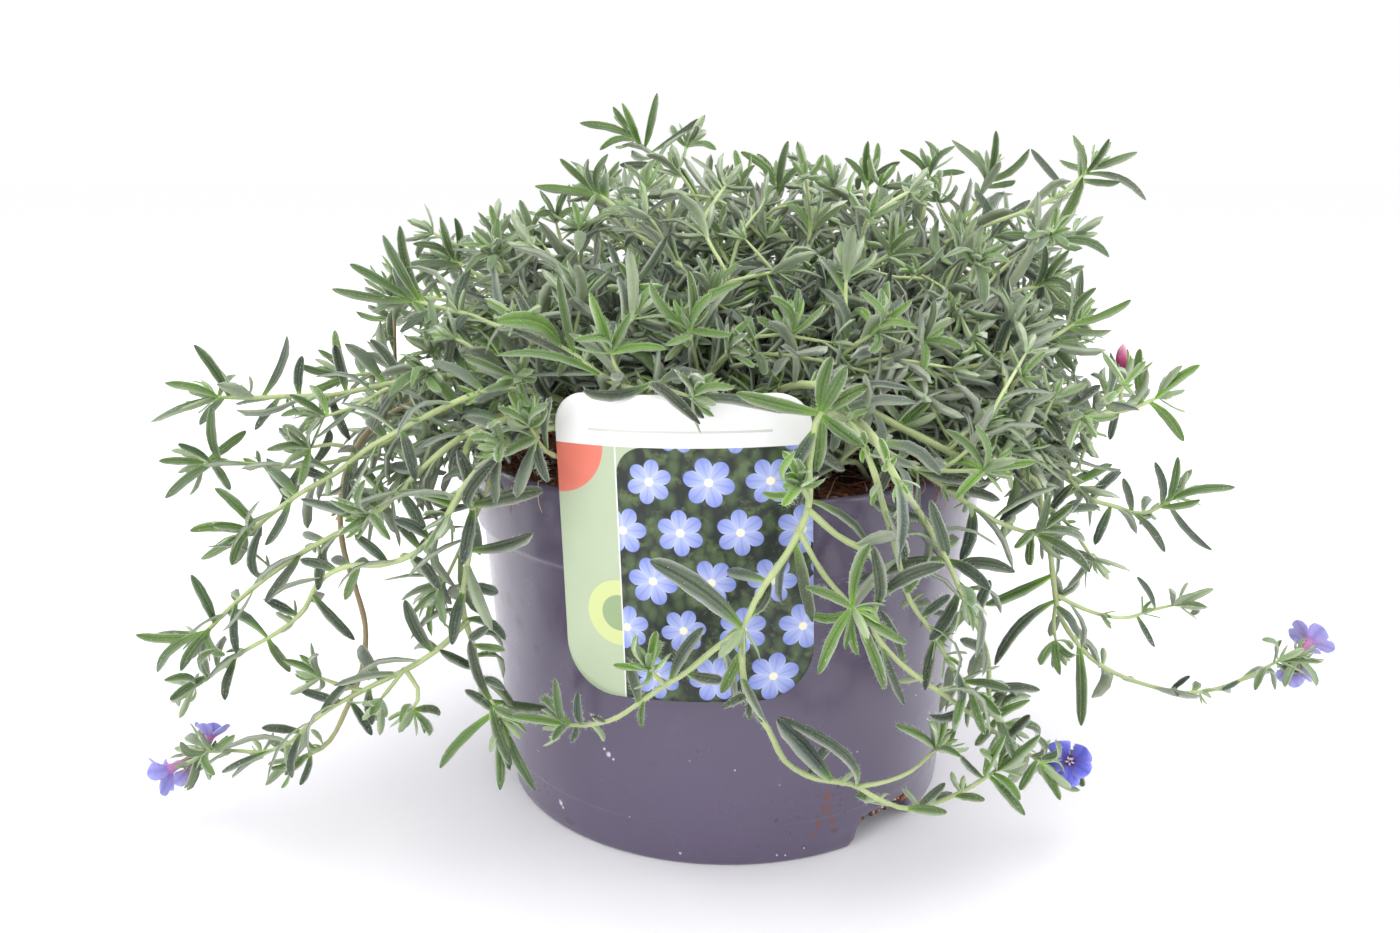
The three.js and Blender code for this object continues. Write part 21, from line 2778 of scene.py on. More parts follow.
1570,23,11,75,0,-43,88,-21,977,-348,356,1493,28,6,92,0,14,3,99]},
{"n": "shoot_back_2", "r": [75, 50], "o": 0, "k": 1, "f": 1, "p": [[-271,508,1194],[-312,528,1253],[-336,552,1354],[-434,514,1437]],
 "l": [149,-404,560,1231,33,13,0,0,11,1,99,208,-243,599,1372,31,7,0,0,-93,0,36,267,-399,454,1327,34,5,0,0,-4,81,59,325,-337,635,1280,31,8,0,0,-30,-31,90,384,-299,482,1407,26,11,0,0,-40,85,35,443,-389,601,1345,29,8,0,0,
56,-17,81,501,-215,581,1368,33,6,0,0,-56,16,81,560,-367,468,1418,33,7,0,0,1,77,64,619,-463,609,1387,33,5,0,0,23,-24,94,677,-301,615,1509,32,7,0,0,-85,-37,36,736,-428,416,1443,28,11,6,0,-55,62,56,795,-454,582,1414,25,6,
27,0,-20,-79,57,853,-400,494,1509,27,11,48,0,-98,-12,-16,912,-502,467,1439,26,13,69,0,1,35,94,971,-473,537,1493,27,11,90,0,-47,-88,-8]},
{"n": "shoot_right_bud", "r": [75, 50], "o": 0, "k": 1, "f": 1, "p": [[441,-485,1235],[543,-480,1217],[673,-415,1224],[812,-387,1087]],
 "l": [142,515,-583,1090,31,7,0,0,98,19,9,230,579,-395,1156,34,7,0,0,84,-51,20,274,593,-596,1219,30,6,0,0,84,53,-13,318,564,-393,1313,32,10,0,0,95,5,-31,362,641,-444,1129,30,9,0,0,64,26,73,450,619,-349,1246,28,9,0,0,95,
-30,9,494,730,-472,1199,28,5,0,0,25,85,46,582,677,-336,1145,29,11,0,0,88,7,48,670,730,-292,1248,31,12,0,0,74,-21,-64,714,710,-443,1103,28,6,0,0,87,49,-1,758,834,-413,1220,28,5,14,0,20,24,-95,802,729,-283,1095,32,7,29,0,
80,-35,-49,846,806,-481,1085,25,9,45,0,48,74,-47,890,847,-351,1130,28,13,61,0,8,-31,-95,934,814,-375,1007,26,9,76,0,97,-6,25,978,863,-407,1077,26,11,92,0,-8,59,-81]},
{"n": "shoot_top_left_2", "r": [75, 50], "o": 0, "k": 1, "f": 1, "p": [[-189,-114,1281],[-116,-155,1313],[5,-198,1362],[183,-214,1323]],
 "l": [143,3,-122,1291,32,13,0,0,6,-82,56,189,-125,-287,1339,27,3,0,0,94,23,24,236,-86,-70,1435,29,3,0,0,75,-66,5,282,-9,-206,1268,30,11,0,0,24,-14,96,328,-128,-236,1426,26,7,0,0,99,-13,0,375,8,-98,1364,28,8,0,0,38,-88,
28,421,-19,-316,1312,33,8,0,0,70,26,66,467,-66,-157,1479,36,7,0,0,90,-43,0,514,85,-144,1283,27,5,0,0,44,-51,74,560,-36,-313,1416,35,9,0,0,98,11,17,606,40,-117,1431,32,12,0,0,79,-60,-5,653,58,-259,1241,28,12,0,0,89,-3,45,
699,60,-251,1472,35,4,0,0,94,-4,-35,745,144,-119,1319,29,6,9,0,66,-75,6,792,145,-290,1322,26,10,26,0,73,68,-4,838,202,-182,1395,29,12,42,0,44,-34,-83,884,181,-202,1284,30,13,59,0,66,-31,68,931,208,-247,1345,24,13,75,0,
45,56,-69,977,243,-179,1325,25,10,92,0,39,-82,-42]},
{"n": "shoot_back_10", "r": [75, 50], "o": 0, "k": 1, "f": 1, "p": [[206,363,1199],[202,420,1264],[231,507,1400],[161,598,1411]],
 "l": [147,315,421,1302,28,7,0,0,-56,66,51,203,130,407,1318,29,7,0,0,50,81,31,258,254,562,1235,29,5,0,0,-22,13,97,312,239,394,1421,33,9,0,0,-13,98,16,367,129,534,1308,32,8,0,0,55,13,83,422,317,466,1378,30,4,0,0,-58,52,
62,477,124,429,1460,35,12,0,0,58,62,52,532,257,599,1367,31,12,0,0,9,-14,99,588,325,444,1491,33,10,0,0,-23,84,49,642,113,530,1467,33,9,0,0,49,69,54,698,280,675,1363,31,7,0,0,-54,38,75,752,186,585,1545,29,9,12,0,-53,73,
-43,807,87,579,1359,32,11,31,0,3,88,47,863,178,677,1425,27,8,51,0,-96,-11,-25,917,110,602,1445,26,8,71,0,1,78,-62,973,117,663,1372,21,5,90,0,-39,21,89]},
{"n": "shoot_back_3", "r": [75, 50], "o": 0, "k": 1, "f": 1, "p": [[-129,637,1264],[-180,666,1248],[-240,680,1253],[-362,693,1124]],
 "l": [149,-281,672,1366,34,12,0,0,-51,51,-69,208,-203,628,1134,26,6,0,0,-76,64,12,267,-219,769,1285,30,13,0,0,-82,-21,-53,325,-317,592,1291,35,10,0,0,-52,80,-30,384,-285,777,1193,36,10,0,0,-65,-20,74,443,-184,690,1399,
27,10,0,0,-98,21,6,501,-316,605,1238,32,13,0,0,-50,63,59,560,-244,796,1272,31,11,0,0,-97,-23,9,619,-310,618,1330,31,7,0,0,-74,33,-59,677,-201,674,1083,34,11,0,0,-96,14,-25,736,-357,776,1273,31,11,6,0,-50,-16,-85,795,
-356,607,1148,27,12,27,0,-36,78,-52,853,-316,774,1084,29,11,48,0,-81,-49,-32,912,-403,690,1146,23,9,69,0,20,10,-97,971,-377,665,1055,22,8,90,0,-79,60,6]},
{"n": "shoot_back_7", "r": [75, 50], "o": 0, "k": 1, "f": 1, "p": [[826,295,1278],[833,332,1279],[847,394,1324],[800,515,1338]],
 "l": [154,902,353,1369,30,4,0,0,1,91,-41,222,690,421,1267,31,10,0,0,59,80,7,289,961,382,1247,28,8,0,0,-27,85,44,357,800,331,1413,34,7,0,0,39,91,13,425,842,479,1274,36,11,0,0,38,10,92,492,965,362,1420,32,4,0,0,-29,92,25,
560,722,413,1406,27,10,0,0,56,74,38,628,886,499,1297,35,8,0,0,-39,30,87,695,869,437,1464,32,12,0,0,-34,92,-18,763,700,504,1303,30,7,15,0,41,83,37,831,884,571,1336,31,6,40,0,-91,42,8,898,742,521,1420,24,6,64,0,-2,88,-48,
966,764,581,1291,24,6,88,0,-8,47,88]},
{"n": "shoot_top_front", "r": [75, 50], "o": 0, "k": 1, "f": 1, "p": [[232,-163,1462],[292,-223,1436],[351,-310,1431],[412,-424,1368]],
 "l": [146,238,-306,1358,35,6,0,0,98,-20,4,198,350,-260,1506,36,11,0,0,31,-42,-86,249,381,-200,1320,26,8,0,0,34,-91,24,301,239,-348,1470,35,9,0,0,86,-39,-33,353,420,-212,1505,36,13,0,0,29,-90,-32,405,324,-321,1350,26,5,
0,0,64,-47,60,456,306,-321,1557,32,11,0,0,66,-67,-34,508,436,-271,1414,34,13,0,0,-1,-98,19,560,299,-404,1418,30,11,0,0,96,-27,10,612,425,-327,1540,34,5,0,0,29,-82,-49,664,387,-311,1318,34,12,0,0,41,-90,15,715,313,-447,
1481,31,7,0,0,65,-51,-57,767,505,-376,1406,27,9,17,0,-24,-83,-51,819,344,-414,1325,32,12,35,0,81,-59,5,871,424,-458,1423,26,6,54,0,18,-26,-95,922,477,-408,1302,23,10,72,0,-11,-99,2,974,389,-497,1351,20,11,91,0,90,-8,
-42]},
{"n": "shoot_right_drop", "r": [75, 50], "o": 0, "k": 1, "f": 1, "p": [[550,-389,1146],[619,-417,1159],[694,-446,1214],[803,-473,1196]],
 "l": [149,669,-449,1077,29,11,0,0,59,-13,80,208,618,-477,1249,34,13,0,0,95,-8,-31,267,725,-315,1167,35,12,0,0,58,-77,27,325,676,-548,1154,28,11,0,0,77,33,54,384,657,-406,1304,31,5,0,0,84,-54,-11,443,768,-426,1158,35,9,
0,0,14,-37,92,560,739,-346,1297,34,6,0,0,58,-76,28,619,757,-525,1148,27,13,0,0,66,5,75,736,812,-384,1170,30,11,6,0,62,-77,19,795,775,-593,1192,29,6,27,0,94,31,-12,853,843,-437,1260,25,5,48,0,53,-46,-71,912,845,-473,1115,
26,3,69,0,73,-27,62]},
{"n": "shoot_top_mid", "r": [75, 50], "o": 0, "k": 1, "f": 1, "p": [[161,112,1550],[152,150,1589],[119,204,1651],[115,270,1669]],
 "l": [157,88,145,1655,33,6,0,0,47,85,22,230,173,308,1546,31,10,0,0,-25,19,95,303,206,138,1732,30,6,0,0,-53,81,23,377,2,177,1638,34,9,0,0,29,64,71,450,205,311,1649,31,8,0,0,-70,12,70,523,95,152,1754,33,9,0,0,-30,95,11,
597,31,307,1646,29,12,0,0,17,9,98,670,182,245,1737,33,5,0,0,-65,75,13,743,-1,266,1712,27,10,8,0,43,89,15,817,187,333,1611,31,4,35,0,-47,65,59,890,119,302,1750,26,9,61,0,-1,84,-54,963,79,335,1656,24,10,87,0,68,44,59]},
{"n": "shoot_front_star_1", "r": [75, 50], "o": 0, "k": 1, "f": 1, "p": [[-119,-568,1267],[-197,-564,1319],[-301,-522,1419],[-398,-464,1482]],
 "l": [144,-245,-652,1254,32,4,0,0,-57,35,75,193,-218,-485,1353,34,9,0,0,-71,-65,26,291,-345,-516,1310,28,10,0,0,-5,-17,98,340,-181,-512,1449,28,8,0,0,-99,-1,14,389,-346,-660,1386,35,4,0,0,-30,73,62,438,-264,-412,1364,
36,6,0,0,-64,-25,73,487,-229,-608,1523,27,5,0,0,-81,52,27,536,-376,-532,1360,33,10,0,0,-13,31,94,584,-229,-435,1484,33,8,0,0,-90,3,43,633,-376,-642,1501,32,13,0,0,-54,73,42,682,-374,-415,1392,28,11,0,0,-52,-9,85,731,
-324,-488,1571,36,11,4,0,-92,39,-9,780,-485,-535,1438,25,5,21,0,-18,74,65,829,-375,-397,1494,31,4,39,0,-90,-36,25,878,-409,-497,1530,28,12,56,0,-52,83,-21,927,-445,-436,1466,24,11,74,0,-2,4,100,976,-424,-412,1556,20,5,
91,0,-93,-3,-37]},
{"n": "shoot_top_mid", "r": [75, 50], "o": 0, "k": 1, "f": 1, "p": [[70,185,1177],[57,230,1212],[54,322,1270],[-19,439,1247]],
 "l": [149,137,213,1308,27,10,0,0,-56,78,28,208,-38,240,1238,29,5,0,0,44,76,48,267,159,336,1191,33,11,0,0,-51,51,70,325,37,221,1322,30,6,0,0,0,100,6,384,18,356,1220,35,7,0,0,40,13,91,443,199,257,1325,29,7,0,0,-30,85,44,
501,-15,317,1329,26,8,0,0,64,75,16,560,113,408,1200,30,10,0,0,-23,50,83,619,87,331,1389,36,9,0,0,-32,94,-11,677,-88,399,1247,27,4,0,0,40,86,33,736,110,493,1249,27,7,6,0,-91,41,-2,795,-60,399,1357,25,8,27,0,-24,80,-55,
853,-44,454,1178,23,6,48,0,-25,66,71,912,0,518,1297,23,12,69,0,-73,23,-64,971,-87,462,1249,28,6,90,0,39,86,-33]},
{"n": "shoot_top_front", "r": [75, 50], "o": 0, "k": 1, "f": 1, "p": [[135,-138,1194],[84,-138,1246],[6,-146,1319],[-155,-105,1331]],
 "l": [147,114,-184,1347,32,5,0,0,-94,33,12,203,-51,-171,1179,34,4,0,0,-30,12,95,258,107,-55,1314,32,4,0,0,-83,-34,45,312,46,-249,1325,31,6,0,0,-69,58,43,367,-70,-66,1249,30,8,0,0,-21,-39,90,422,98,-126,1433,32,6,0,0,
-94,-26,20,477,-15,-238,1289,33,11,0,0,-34,35,87,532,-21,-16,1364,35,11,0,0,-54,-60,59,588,16,-241,1437,28,11,0,0,-91,37,17,642,-134,-119,1270,32,12,0,0,-31,-8,95,698,-74,-65,1458,26,11,0,0,-92,-18,-36,752,-126,-187,
1333,33,12,12,0,-44,90,8,807,-118,-57,1311,28,12,31,0,-77,-56,30,863,-158,-130,1427,25,7,51,0,-75,36,-55,917,-186,-120,1293,24,12,71,0,-40,56,73,973,-194,-60,1356,25,13,90,0,-71,-55,-45]},
{"n": "shoot_top_fan", "r": [75, 50], "o": 0, "k": 1, "f": 1, "p": [[-69,-242,1116],[-31,-273,1160],[4,-305,1258],[111,-357,1245]],
 "l": [151,-112,-389,1218,31,7,0,0,90,-15,41,214,27,-176,1243,36,7,0,0,42,-82,39,277,54,-395,1152,30,3,0,0,17,14,98,340,-101,-279,1310,32,8,0,0,83,-41,38,403,81,-268,1259,26,9,0,0,-51,-45,73,466,-60,-406,1306,27,11,0,0,
53,45,72,529,-20,-210,1364,34,6,0,0,36,-81,47,591,109,-357,1296,29,11,0,0,-41,3,91,654,-6,-384,1346,27,9,0,0,100,-2,6,717,144,-266,1304,30,9,0,0,38,-91,-15,780,107,-428,1186,32,12,21,0,84,21,50,843,132,-376,1348,26,13,
44,0,67,-27,-69,906,179,-330,1196,23,6,66,0,28,-91,32,969,145,-418,1245,21,6,89,0,78,55,-28]},
{"n": "shoot_top_mid", "r": [75, 50], "o": 0, "k": 1, "f": 1, "p": [[86,163,1240],[76,126,1287],[56,65,1374],[13,17,1394]],
 "l": [154,39,165,1424,30,5,0,0,3,-99,11,222,177,18,1321,33,9,0,0,-65,-20,74,289,-66,98,1314,26,7,0,0,32,-55,77,357,119,129,1415,28,6,0,0,-53,-81,23,425,62,-34,1356,31,4,0,0,-15,31,94,492,-14,119,1444,27,11,0,0,32,-87,
38,560,142,12,1453,27,10,0,0,-85,-30,42,628,-26,2,1393,26,4,0,0,46,-23,86,695,38,51,1509,29,6,0,0,-50,-86,-12,763,50,-61,1356,25,9,15,0,-77,-19,61,831,-56,54,1410,31,6,40,0,-12,-99,7,898,13,-48,1455,28,10,64,0,-87,-20,
-44,966,-41,-33,1374,25,5,88,0,-9,-24,97]},
{"n": "shoot_left_top", "r": [75, 50], "o": 0, "k": 1, "f": 1, "p": [[-499,-210,1333],[-573,-199,1246],[-689,-215,1196],[-770,-221,1014]],
 "l": [142,-553,-93,1239,31,8,0,0,-57,-46,-68,186,-662,-278,1315,32,8,0,0,-39,27,-88,230,-494,-200,1120,31,7,0,0,-94,10,-33,274,-671,-100,1317,34,5,0,0,-54,-13,-83,318,-647,-325,1188,33,4,0,0,-64,62,-46,362,-635,-130,
1172,35,5,0,0,-76,-65,-8,406,-702,-236,1317,32,4,0,0,-62,4,-78,450,-686,-288,1099,26,4,0,0,-90,24,36,494,-769,-120,1255,31,5,0,0,-53,-71,-46,538,-731,-305,1246,36,6,0,0,-68,47,-57,582,-699,-174,1110,28,10,0,0,-89,-41,17,
626,-817,-183,1304,26,5,0,0,-58,-17,-80,670,-681,-341,1101,28,5,0,0,-74,37,-56,714,-716,-102,1133,29,8,0,0,-52,-36,-77,758,-841,-304,1162,34,5,14,0,-16,17,-97,846,-814,-169,1043,27,4,45,0,27,-56,-79,890,-773,-293,1019,
29,5,61,0,-21,67,-71,978,-848,-227,970,23,8,92,0,56,5,-83]},
{"n": "shoot_back_10", "r": [75, 50], "o": 0, "k": 1, "f": 1, "p": [[214,380,1236],[258,410,1309],[319,474,1452],[408,471,1486]],
 "l": [146,271,547,1322,27,7,0,0,51,-41,76,198,344,332,1321,33,12,0,0,9,68,72,249,151,431,1422,28,3,0,0,82,28,50,301,360,517,1331,36,4,0,0,-8,-20,98,353,310,341,1435,33,10,0,0,20,87,45,405,233,497,1418,28,10,0,0,85,-13,
51,456,429,476,1397,31,12,0,0,-30,31,90,508,256,411,1505,33,5,0,0,59,72,37,560,318,568,1448,35,8,0,0,32,-35,88,612,386,415,1508,28,12,0,0,2,83,56,664,281,562,1578,27,3,0,0,94,-9,34,715,458,479,1443,29,4,0,0,15,19,97,767,
391,438,1574,32,3,17,0,91,28,-31,819,464,574,1481,29,11,35,0,64,-72,27,871,448,368,1464,31,6,54,0,79,52,32,922,434,483,1539,28,7,72,0,76,-35,-55,974,488,478,1480,25,9,91,0,6,-43,90]},
{"n": "shoot_top_fan", "r": [75, 50], "o": 0, "k": 1, "f": 1, "p": [[-76,-216,1054],[-106,-232,1092],[-169,-255,1149],[-236,-263,1167]],
 "l": [157,-214,-171,1134,29,8,0,0,1,-76,65,230,-38,-255,1184,32,11,0,0,-88,-23,42,377,-143,-168,1182,35,10,0,0,-61,-71,34,450,-125,-374,1201,34,10,0,0,-85,29,44,523,-282,-206,1109,27,6,0,0,-23,-47,85,597,-146,-242,1264,
32,12,0,0,-94,-33,9,743,-291,-172,1207,31,13,8,0,-59,-80,10,817,-235,-330,1239,25,11,35,0,-94,26,-20,963,-276,-242,1219,27,9,87,0,-75,-46,-48]},
{"n": "shoot_top_left_2", "r": [75, 50], "o": 0, "k": 1, "f": 1, "p": [[-186,-53,1209],[-204,-87,1223],[-221,-135,1255],[-272,-186,1230]],
 "l": [164,-247,-85,1329,28,9,0,0,-26,-93,-25,252,-150,-233,1236,35,4,0,0,-87,-23,44,340,-353,-110,1232,30,7,0,0,16,-83,53,428,-151,-88,1353,32,9,0,0,-42,-87,28,516,-219,-260,1215,33,7,0,0,-24,-17,96,604,-329,-109,1359,
29,4,0,0,-8,-99,7,692,-197,-243,1277,30,6,0,0,-93,-29,-24,780,-306,-127,1164,32,4,21,0,-41,-91,7,868,-336,-236,1304,28,8,53,0,-33,-36,-87,956,-277,-253,1176,27,4,84,0,-98,-1,21]},
{"n": "shoot_left_low_1", "r": [75, 50], "o": 0, "k": 1, "f": 1, "p": [[-295,-358,1049],[-289,-408,1139],[-274,-460,1275],[-211,-543,1371]],
 "l": [189,-376,-342,1236,27,12,0,0,40,-78,49,236,-159,-442,1198,33,9,0,0,-61,-37,70,328,-268,-347,1294,31,10,0,0,-1,-93,36,375,-209,-549,1230,35,10,0,0,-38,28,88,421,-395,-424,1283,34,3,0,0,66,-41,63,467,-181,-403,1322,
28,9,0,0,-56,-60,57,514,-310,-565,1254,28,10,0,0,21,26,94,560,-325,-394,1353,32,6,0,0,43,-78,46,606,-178,-477,1288,35,10,0,0,-39,-31,87,653,-333,-583,1377,36,10,0,0,80,13,58,699,-232,-411,1401,34,13,0,0,21,-90,38,745,
-164,-595,1319,32,8,9,0,-14,4,99,792,-312,-540,1425,33,6,26,0,86,-46,24,838,-157,-508,1390,25,4,42,0,-27,-92,28,884,-224,-602,1352,27,3,59,0,61,18,77,931,-209,-539,1442,29,13,75,0,57,-79,-22,977,-163,-574,1395,24,5,92,0,
-63,-31,71]},
{"n": "shoot_back_10", "r": [75, 50], "o": 0, "k": 1, "f": 1, "p": [[264,493,1419],[278,521,1445],[289,534,1479],[319,598,1504]],
 "l": [164,347,590,1436,34,5,0,0,-30,23,92,252,296,508,1548,30,10,0,0,29,96,0,340,235,649,1475,31,7,0,0,57,0,82,428,383,465,1538,35,4,0,0,-29,58,76,516,188,539,1563,32,4,0,0,73,13,68,604,359,665,1485,35,4,0,0,4,-11,99,
692,366,524,1577,32,10,0,0,8,99,8,780,241,628,1520,25,12,21,0,82,53,21,868,383,619,1477,27,5,53,0,-31,71,63,956,334,636,1592,26,11,84,0,39,78,-48]},
{"n": "shoot_back_11", "r": [75, 50], "o": 0, "k": 1, "f": 1, "p": [[-326,-21,1102],[-308,37,1162],[-280,121,1243],[-182,272,1263]],
 "l": [144,-234,111,1105,28,5,0,0,-14,30,94,193,-283,-51,1294,35,9,0,0,15,93,33,242,-401,143,1163,31,6,0,0,60,31,73,291,-206,51,1182,27,8,0,0,-33,68,65,340,-361,58,1312,35,11,0,0,59,80,10,389,-293,158,1185,36,8,0,0,12,
-10,99,438,-222,18,1278,29,7,0,0,-14,84,52,487,-405,150,1295,27,6,0,0,76,42,50,536,-198,169,1234,34,11,0,0,-45,31,84,584,-299,75,1336,35,9,0,0,36,91,20,633,-312,279,1210,32,13,0,0,66,22,72,682,-164,110,1282,29,6,0,0,7,
97,22,731,-290,235,1331,28,3,4,0,83,49,-28,780,-177,250,1179,27,8,21,0,19,56,80,829,-177,230,1315,24,4,39,0,9,78,-62,878,-237,332,1257,30,9,56,0,99,13,9,927,-123,261,1245,27,9,74,0,-22,93,28,976,-158,335,1320,23,10,91,0,
52,38,-77]},
{"n": "shoot_right_drop", "r": [75, 50], "o": 0, "k": 1, "f": 1, "p": [[790,-418,1193],[847,-382,1163],[892,-355,1149],[985,-260,1094]],
 "l": [214,956,-332,1241,33,7,0,0,33,31,-89,277,809,-256,1060,36,5,0,0,99,14,-10,340,956,-420,1145,31,10,0,0,28,91,-31,403,936,-245,1242,28,12,0,0,76,-6,-64,466,928,-351,1003,31,6,0,0,84,38,40,591,842,-226,1142,30,6,0,0,
94,22,-26,717,943,-278,1232,35,4,0,0,59,50,-63,780,911,-271,1050,29,11,21,0,90,39,18,906,963,-197,1124,29,4,66,0,78,4,-62,969,1031,-245,1025,26,6,89,0,29,83,48]},
{"n": "shoot_right_bud", "r": [75, 50], "o": 0, "k": 1, "f": 1, "p": [[394,-453,1181],[430,-471,1149],[473,-497,1144],[606,-498,1096]],
 "l": [154,461,-583,1200,28,8,0,0,57,0,-82,222,511,-417,1121,28,11,0,0,20,-81,-55,357,538,-536,1268,28,5,0,0,55,-43,-71,425,527,-461,1066,33,11,0,0,43,-86,29,560,549,-431,1228,34,5,0,0,65,-72,-24,628,526,-537,1060,27,7,
0,0,81,-1,59,695,579,-564,1234,27,11,0,0,73,12,-67,763,591,-408,1085,34,9,15,0,69,-71,-12,831,591,-570,1082,26,13,40,0,74,67,-9,898,636,-471,1155,24,4,64,0,56,-21,-81,966,631,-481,1043,25,8,88,0,83,-28,48]},
{"n": "shoot_right_level", "r": [75, 50], "o": 0, "k": 1, "f": 1, "p": [[602,-362,1313],[676,-312,1289],[764,-278,1282],[864,-192,1194]],
 "l": [146,695,-260,1386,33,9,0,0,62,29,-73,249,771,-351,1322,36,3,0,0,32,82,-48,301,660,-158,1351,35,10,0,0,93,18,-33,353,758,-349,1167,36,4,0,0,76,58,30,405,781,-303,1402,29,8,0,0,73,40,-56,456,800,-171,1258,32,6,0,0,
80,-49,34,508,822,-393,1286,35,6,0,0,69,72,7,560,792,-209,1380,28,11,0,0,85,-2,-52,612,813,-243,1171,32,5,0,0,79,27,54,664,882,-296,1335,34,7,0,0,39,64,-66,715,794,-122,1240,26,3,0,0,87,-20,-45,767,851,-303,1183,31,8,17,
0,42,88,-22,819,891,-159,1298,25,6,35,0,32,24,-92,871,816,-164,1138,23,5,54,0,98,19,5,922,916,-219,1199,22,10,72,0,-7,80,-59,974,890,-121,1188,22,13,91,0,52,-36,-77]},
{"n": "shoot_back_3", "r": [75, 50], "o": 0, "k": 1, "f": 1, "p": [[-181,757,1100],[-206,768,1125],[-239,783,1206],[-286,761,1297]],
 "l": [154,-301,896,1098,34,5,0,0,-46,-31,83,222,-152,760,1272,34,10,0,0,-91,33,26,289,-315,746,1168,27,10,0,0,24,57,79,357,-182,895,1210,31,13,0,0,-65,-31,70,425,-228,705,1236,32,11,0,0,-37,78,52,492,-342,867,1208,31,5,
0,0,23,-21,95,560,-142,828,1312,32,12,0,0,-84,-2,54,628,-283,685,1249,27,9,0,0,-21,55,81,695,-351,869,1249,29,7,0,0,-7,-45,89,763,-210,775,1342,32,5,15,0,-91,-23,34,831,-337,680,1280,24,11,40,0,-7,35,93,898,-311,793,
1341,25,11,64,0,-12,-96,26,966,-283,721,1362,25,8,88,0,-90,38,20]},
{"n": "shoot_top_right_2", "r": [75, 50], "o": 0, "k": 1, "f": 1, "p": [[381,256,1252],[383,305,1261],[385,382,1265],[325,524,1215]],
 "l": [149,451,335,1346,36,12,0,0,-36,88,-30,208,290,355,1284,28,9,0,0,62,78,8,267,491,421,1208,27,13,0,0,-55,67,50,325,376,388,1406,29,5,0,0,9,86,-50,384,343,432,1221,27,3,0,0,60,45,66,443,506,359,1312,33,3,0,0,-28,96,
3,501,295,423,1358,35,8,0,0,52,82,-24,560,423,454,1168,33,7,0,0,-21,72,66,619,414,451,1349,35,7,0,0,-34,71,-62,677,267,449,1225,30,5,0,0,48,88,-2,736,447,483,1219,35,7,6,0,-76,64,-14,795,297,513,1299,27,4,27,0,4,55,-84,
853,303,501,1133,28,4,48,0,-13,90,42,912,368,585,1254,25,8,69,0,-71,33,-63,971,258,559,1216,23,11,90,0,49,72,-49]},
{"n": "shoot_right_drop", "r": [75, 50], "o": 0, "k": 1, "f": 1, "p": [[857,-399,1097],[888,-439,1115],[954,-491,1216],[951,-619,1291]],
 "l": [312,866,-545,1207,29,8,0,0,98,-1,19,588,916,-584,1232,29,6,0,0,69,10,72,642,983,-415,1336,27,4,0,0,26,-87,42,698,998,-605,1223,33,6,0,0,-18,-8,98,863,897,-641,1247,30,10,51,0,44,-47,76]},
{"n": "shoot_centre_right", "r": [75, 50], "o": 0, "k": 1, "f": 1, "p": [[137,-261,1275],[110,-319,1290],[48,-377,1351],[0,-452,1378]],
 "l": [151,-2,-351,1253,35,9,0,0,35,-86,37,214,122,-374,1416,29,5,0,0,-49,-76,-42,277,93,-434,1254,31,8,0,0,-53,-11,84,403,166,-426,1383,33,7,0,0,-88,-29,37,466,-55,-396,1319,28,6,0,0,18,-36,92,529,55,-335,1456,29,5,0,0,
-66,-75,0,591,37,-489,1370,35,7,0,0,-72,30,62,654,-110,-361,1391,35,3,0,0,3,-91,41,717,63,-465,1485,26,7,0,0,-80,-57,-20,780,-14,-495,1280,28,8,21,0,-39,-49,78,843,-49,-453,1435,26,12,44,0,7,-90,-43,906,17,-509,1398,25,
4,66,0,-100,-6,-6,969,-57,-487,1374,22,12,89,0,44,-67,60]},
{"n": "shoot_top_right", "r": [75, 50], "o": 0, "k": 1, "f": 1, "p": [[212,252,1205],[231,299,1209],[248,376,1221],[259,506,1131]],
 "l": [151,228,411,1115,31,5,0,0,57,43,70,214,339,323,1269,32,11,0,0,-20,94,-29,277,163,425,1272,29,12,0,0,83,51,-23,340,306,375,1151,26,12,0,0,-19,71,68,403,260,338,1319,29,10,0,0,14,95,-27,466,165,476,1210,31,11,0,0,
73,38,57,529,372,430,1258,28,7,0,0,-59,79,15,591,175,421,1339,29,12,0,0,37,88,-29,654,247,424,1073,29,9,0,0,16,93,32,717,340,474,1269,29,12,0,0,-17,68,-71,780,151,521,1147,27,5,21,0,74,48,-47,843,313,478,1103,29,10,44,0,
-58,81,-6,906,256,575,1169,25,12,66,0,9,9,-99,969,233,526,1080,24,3,89,0,61,77,17]},
{"n": "shoot_top_mid", "r": [75, 50], "o": 0, "k": 1, "f": 1, "p": [[99,142,1279],[33,141,1294],[-82,156,1343],[-280,207,1225]],
 "l": [143,-12,54,1366,35,9,0,0,-81,48,-32,189,-54,165,1213,32,4,0,0,-54,-25,80,236,13,202,1443,32,4,0,0,-96,-19,-19,282,-42,-7,1277,30,9,0,0,-82,46,35,328,-48,272,1291,30,11,0,0,-77,-48,42,375,3,97,1436,28,4,0,0,-95,30,
-3,421,-92,120,1270,31,11,0,0,-40,20,90,467,0,262,1428,36,11,0,0,-91,-26,33,514,-80,37,1404,34,5,0,0,-73,61,31,560,-168,239,1311,32,8,0,0,-46,-43,78,606,-103,170,1449,35,5,0,0,-90,10,-43,653,-173,94,1279,33,7,0,0,-63,73,
26,699,-122,268,1332,31,10,0,0,-92,-22,-33,745,-223,122,1370,34,6,9,0,-51,46,-73,792,-161,180,1213,33,10,26,0,-97,22,13,838,-271,256,1308,24,12,42,0,-39,-30,-87,884,-304,145,1222,26,12,59,0,-23,91,-35,931,-257,257,1196,
22,12,75,0,-91,-40,-12,977,-348,216,1237,21,4,92,0,-1,16,-99]},
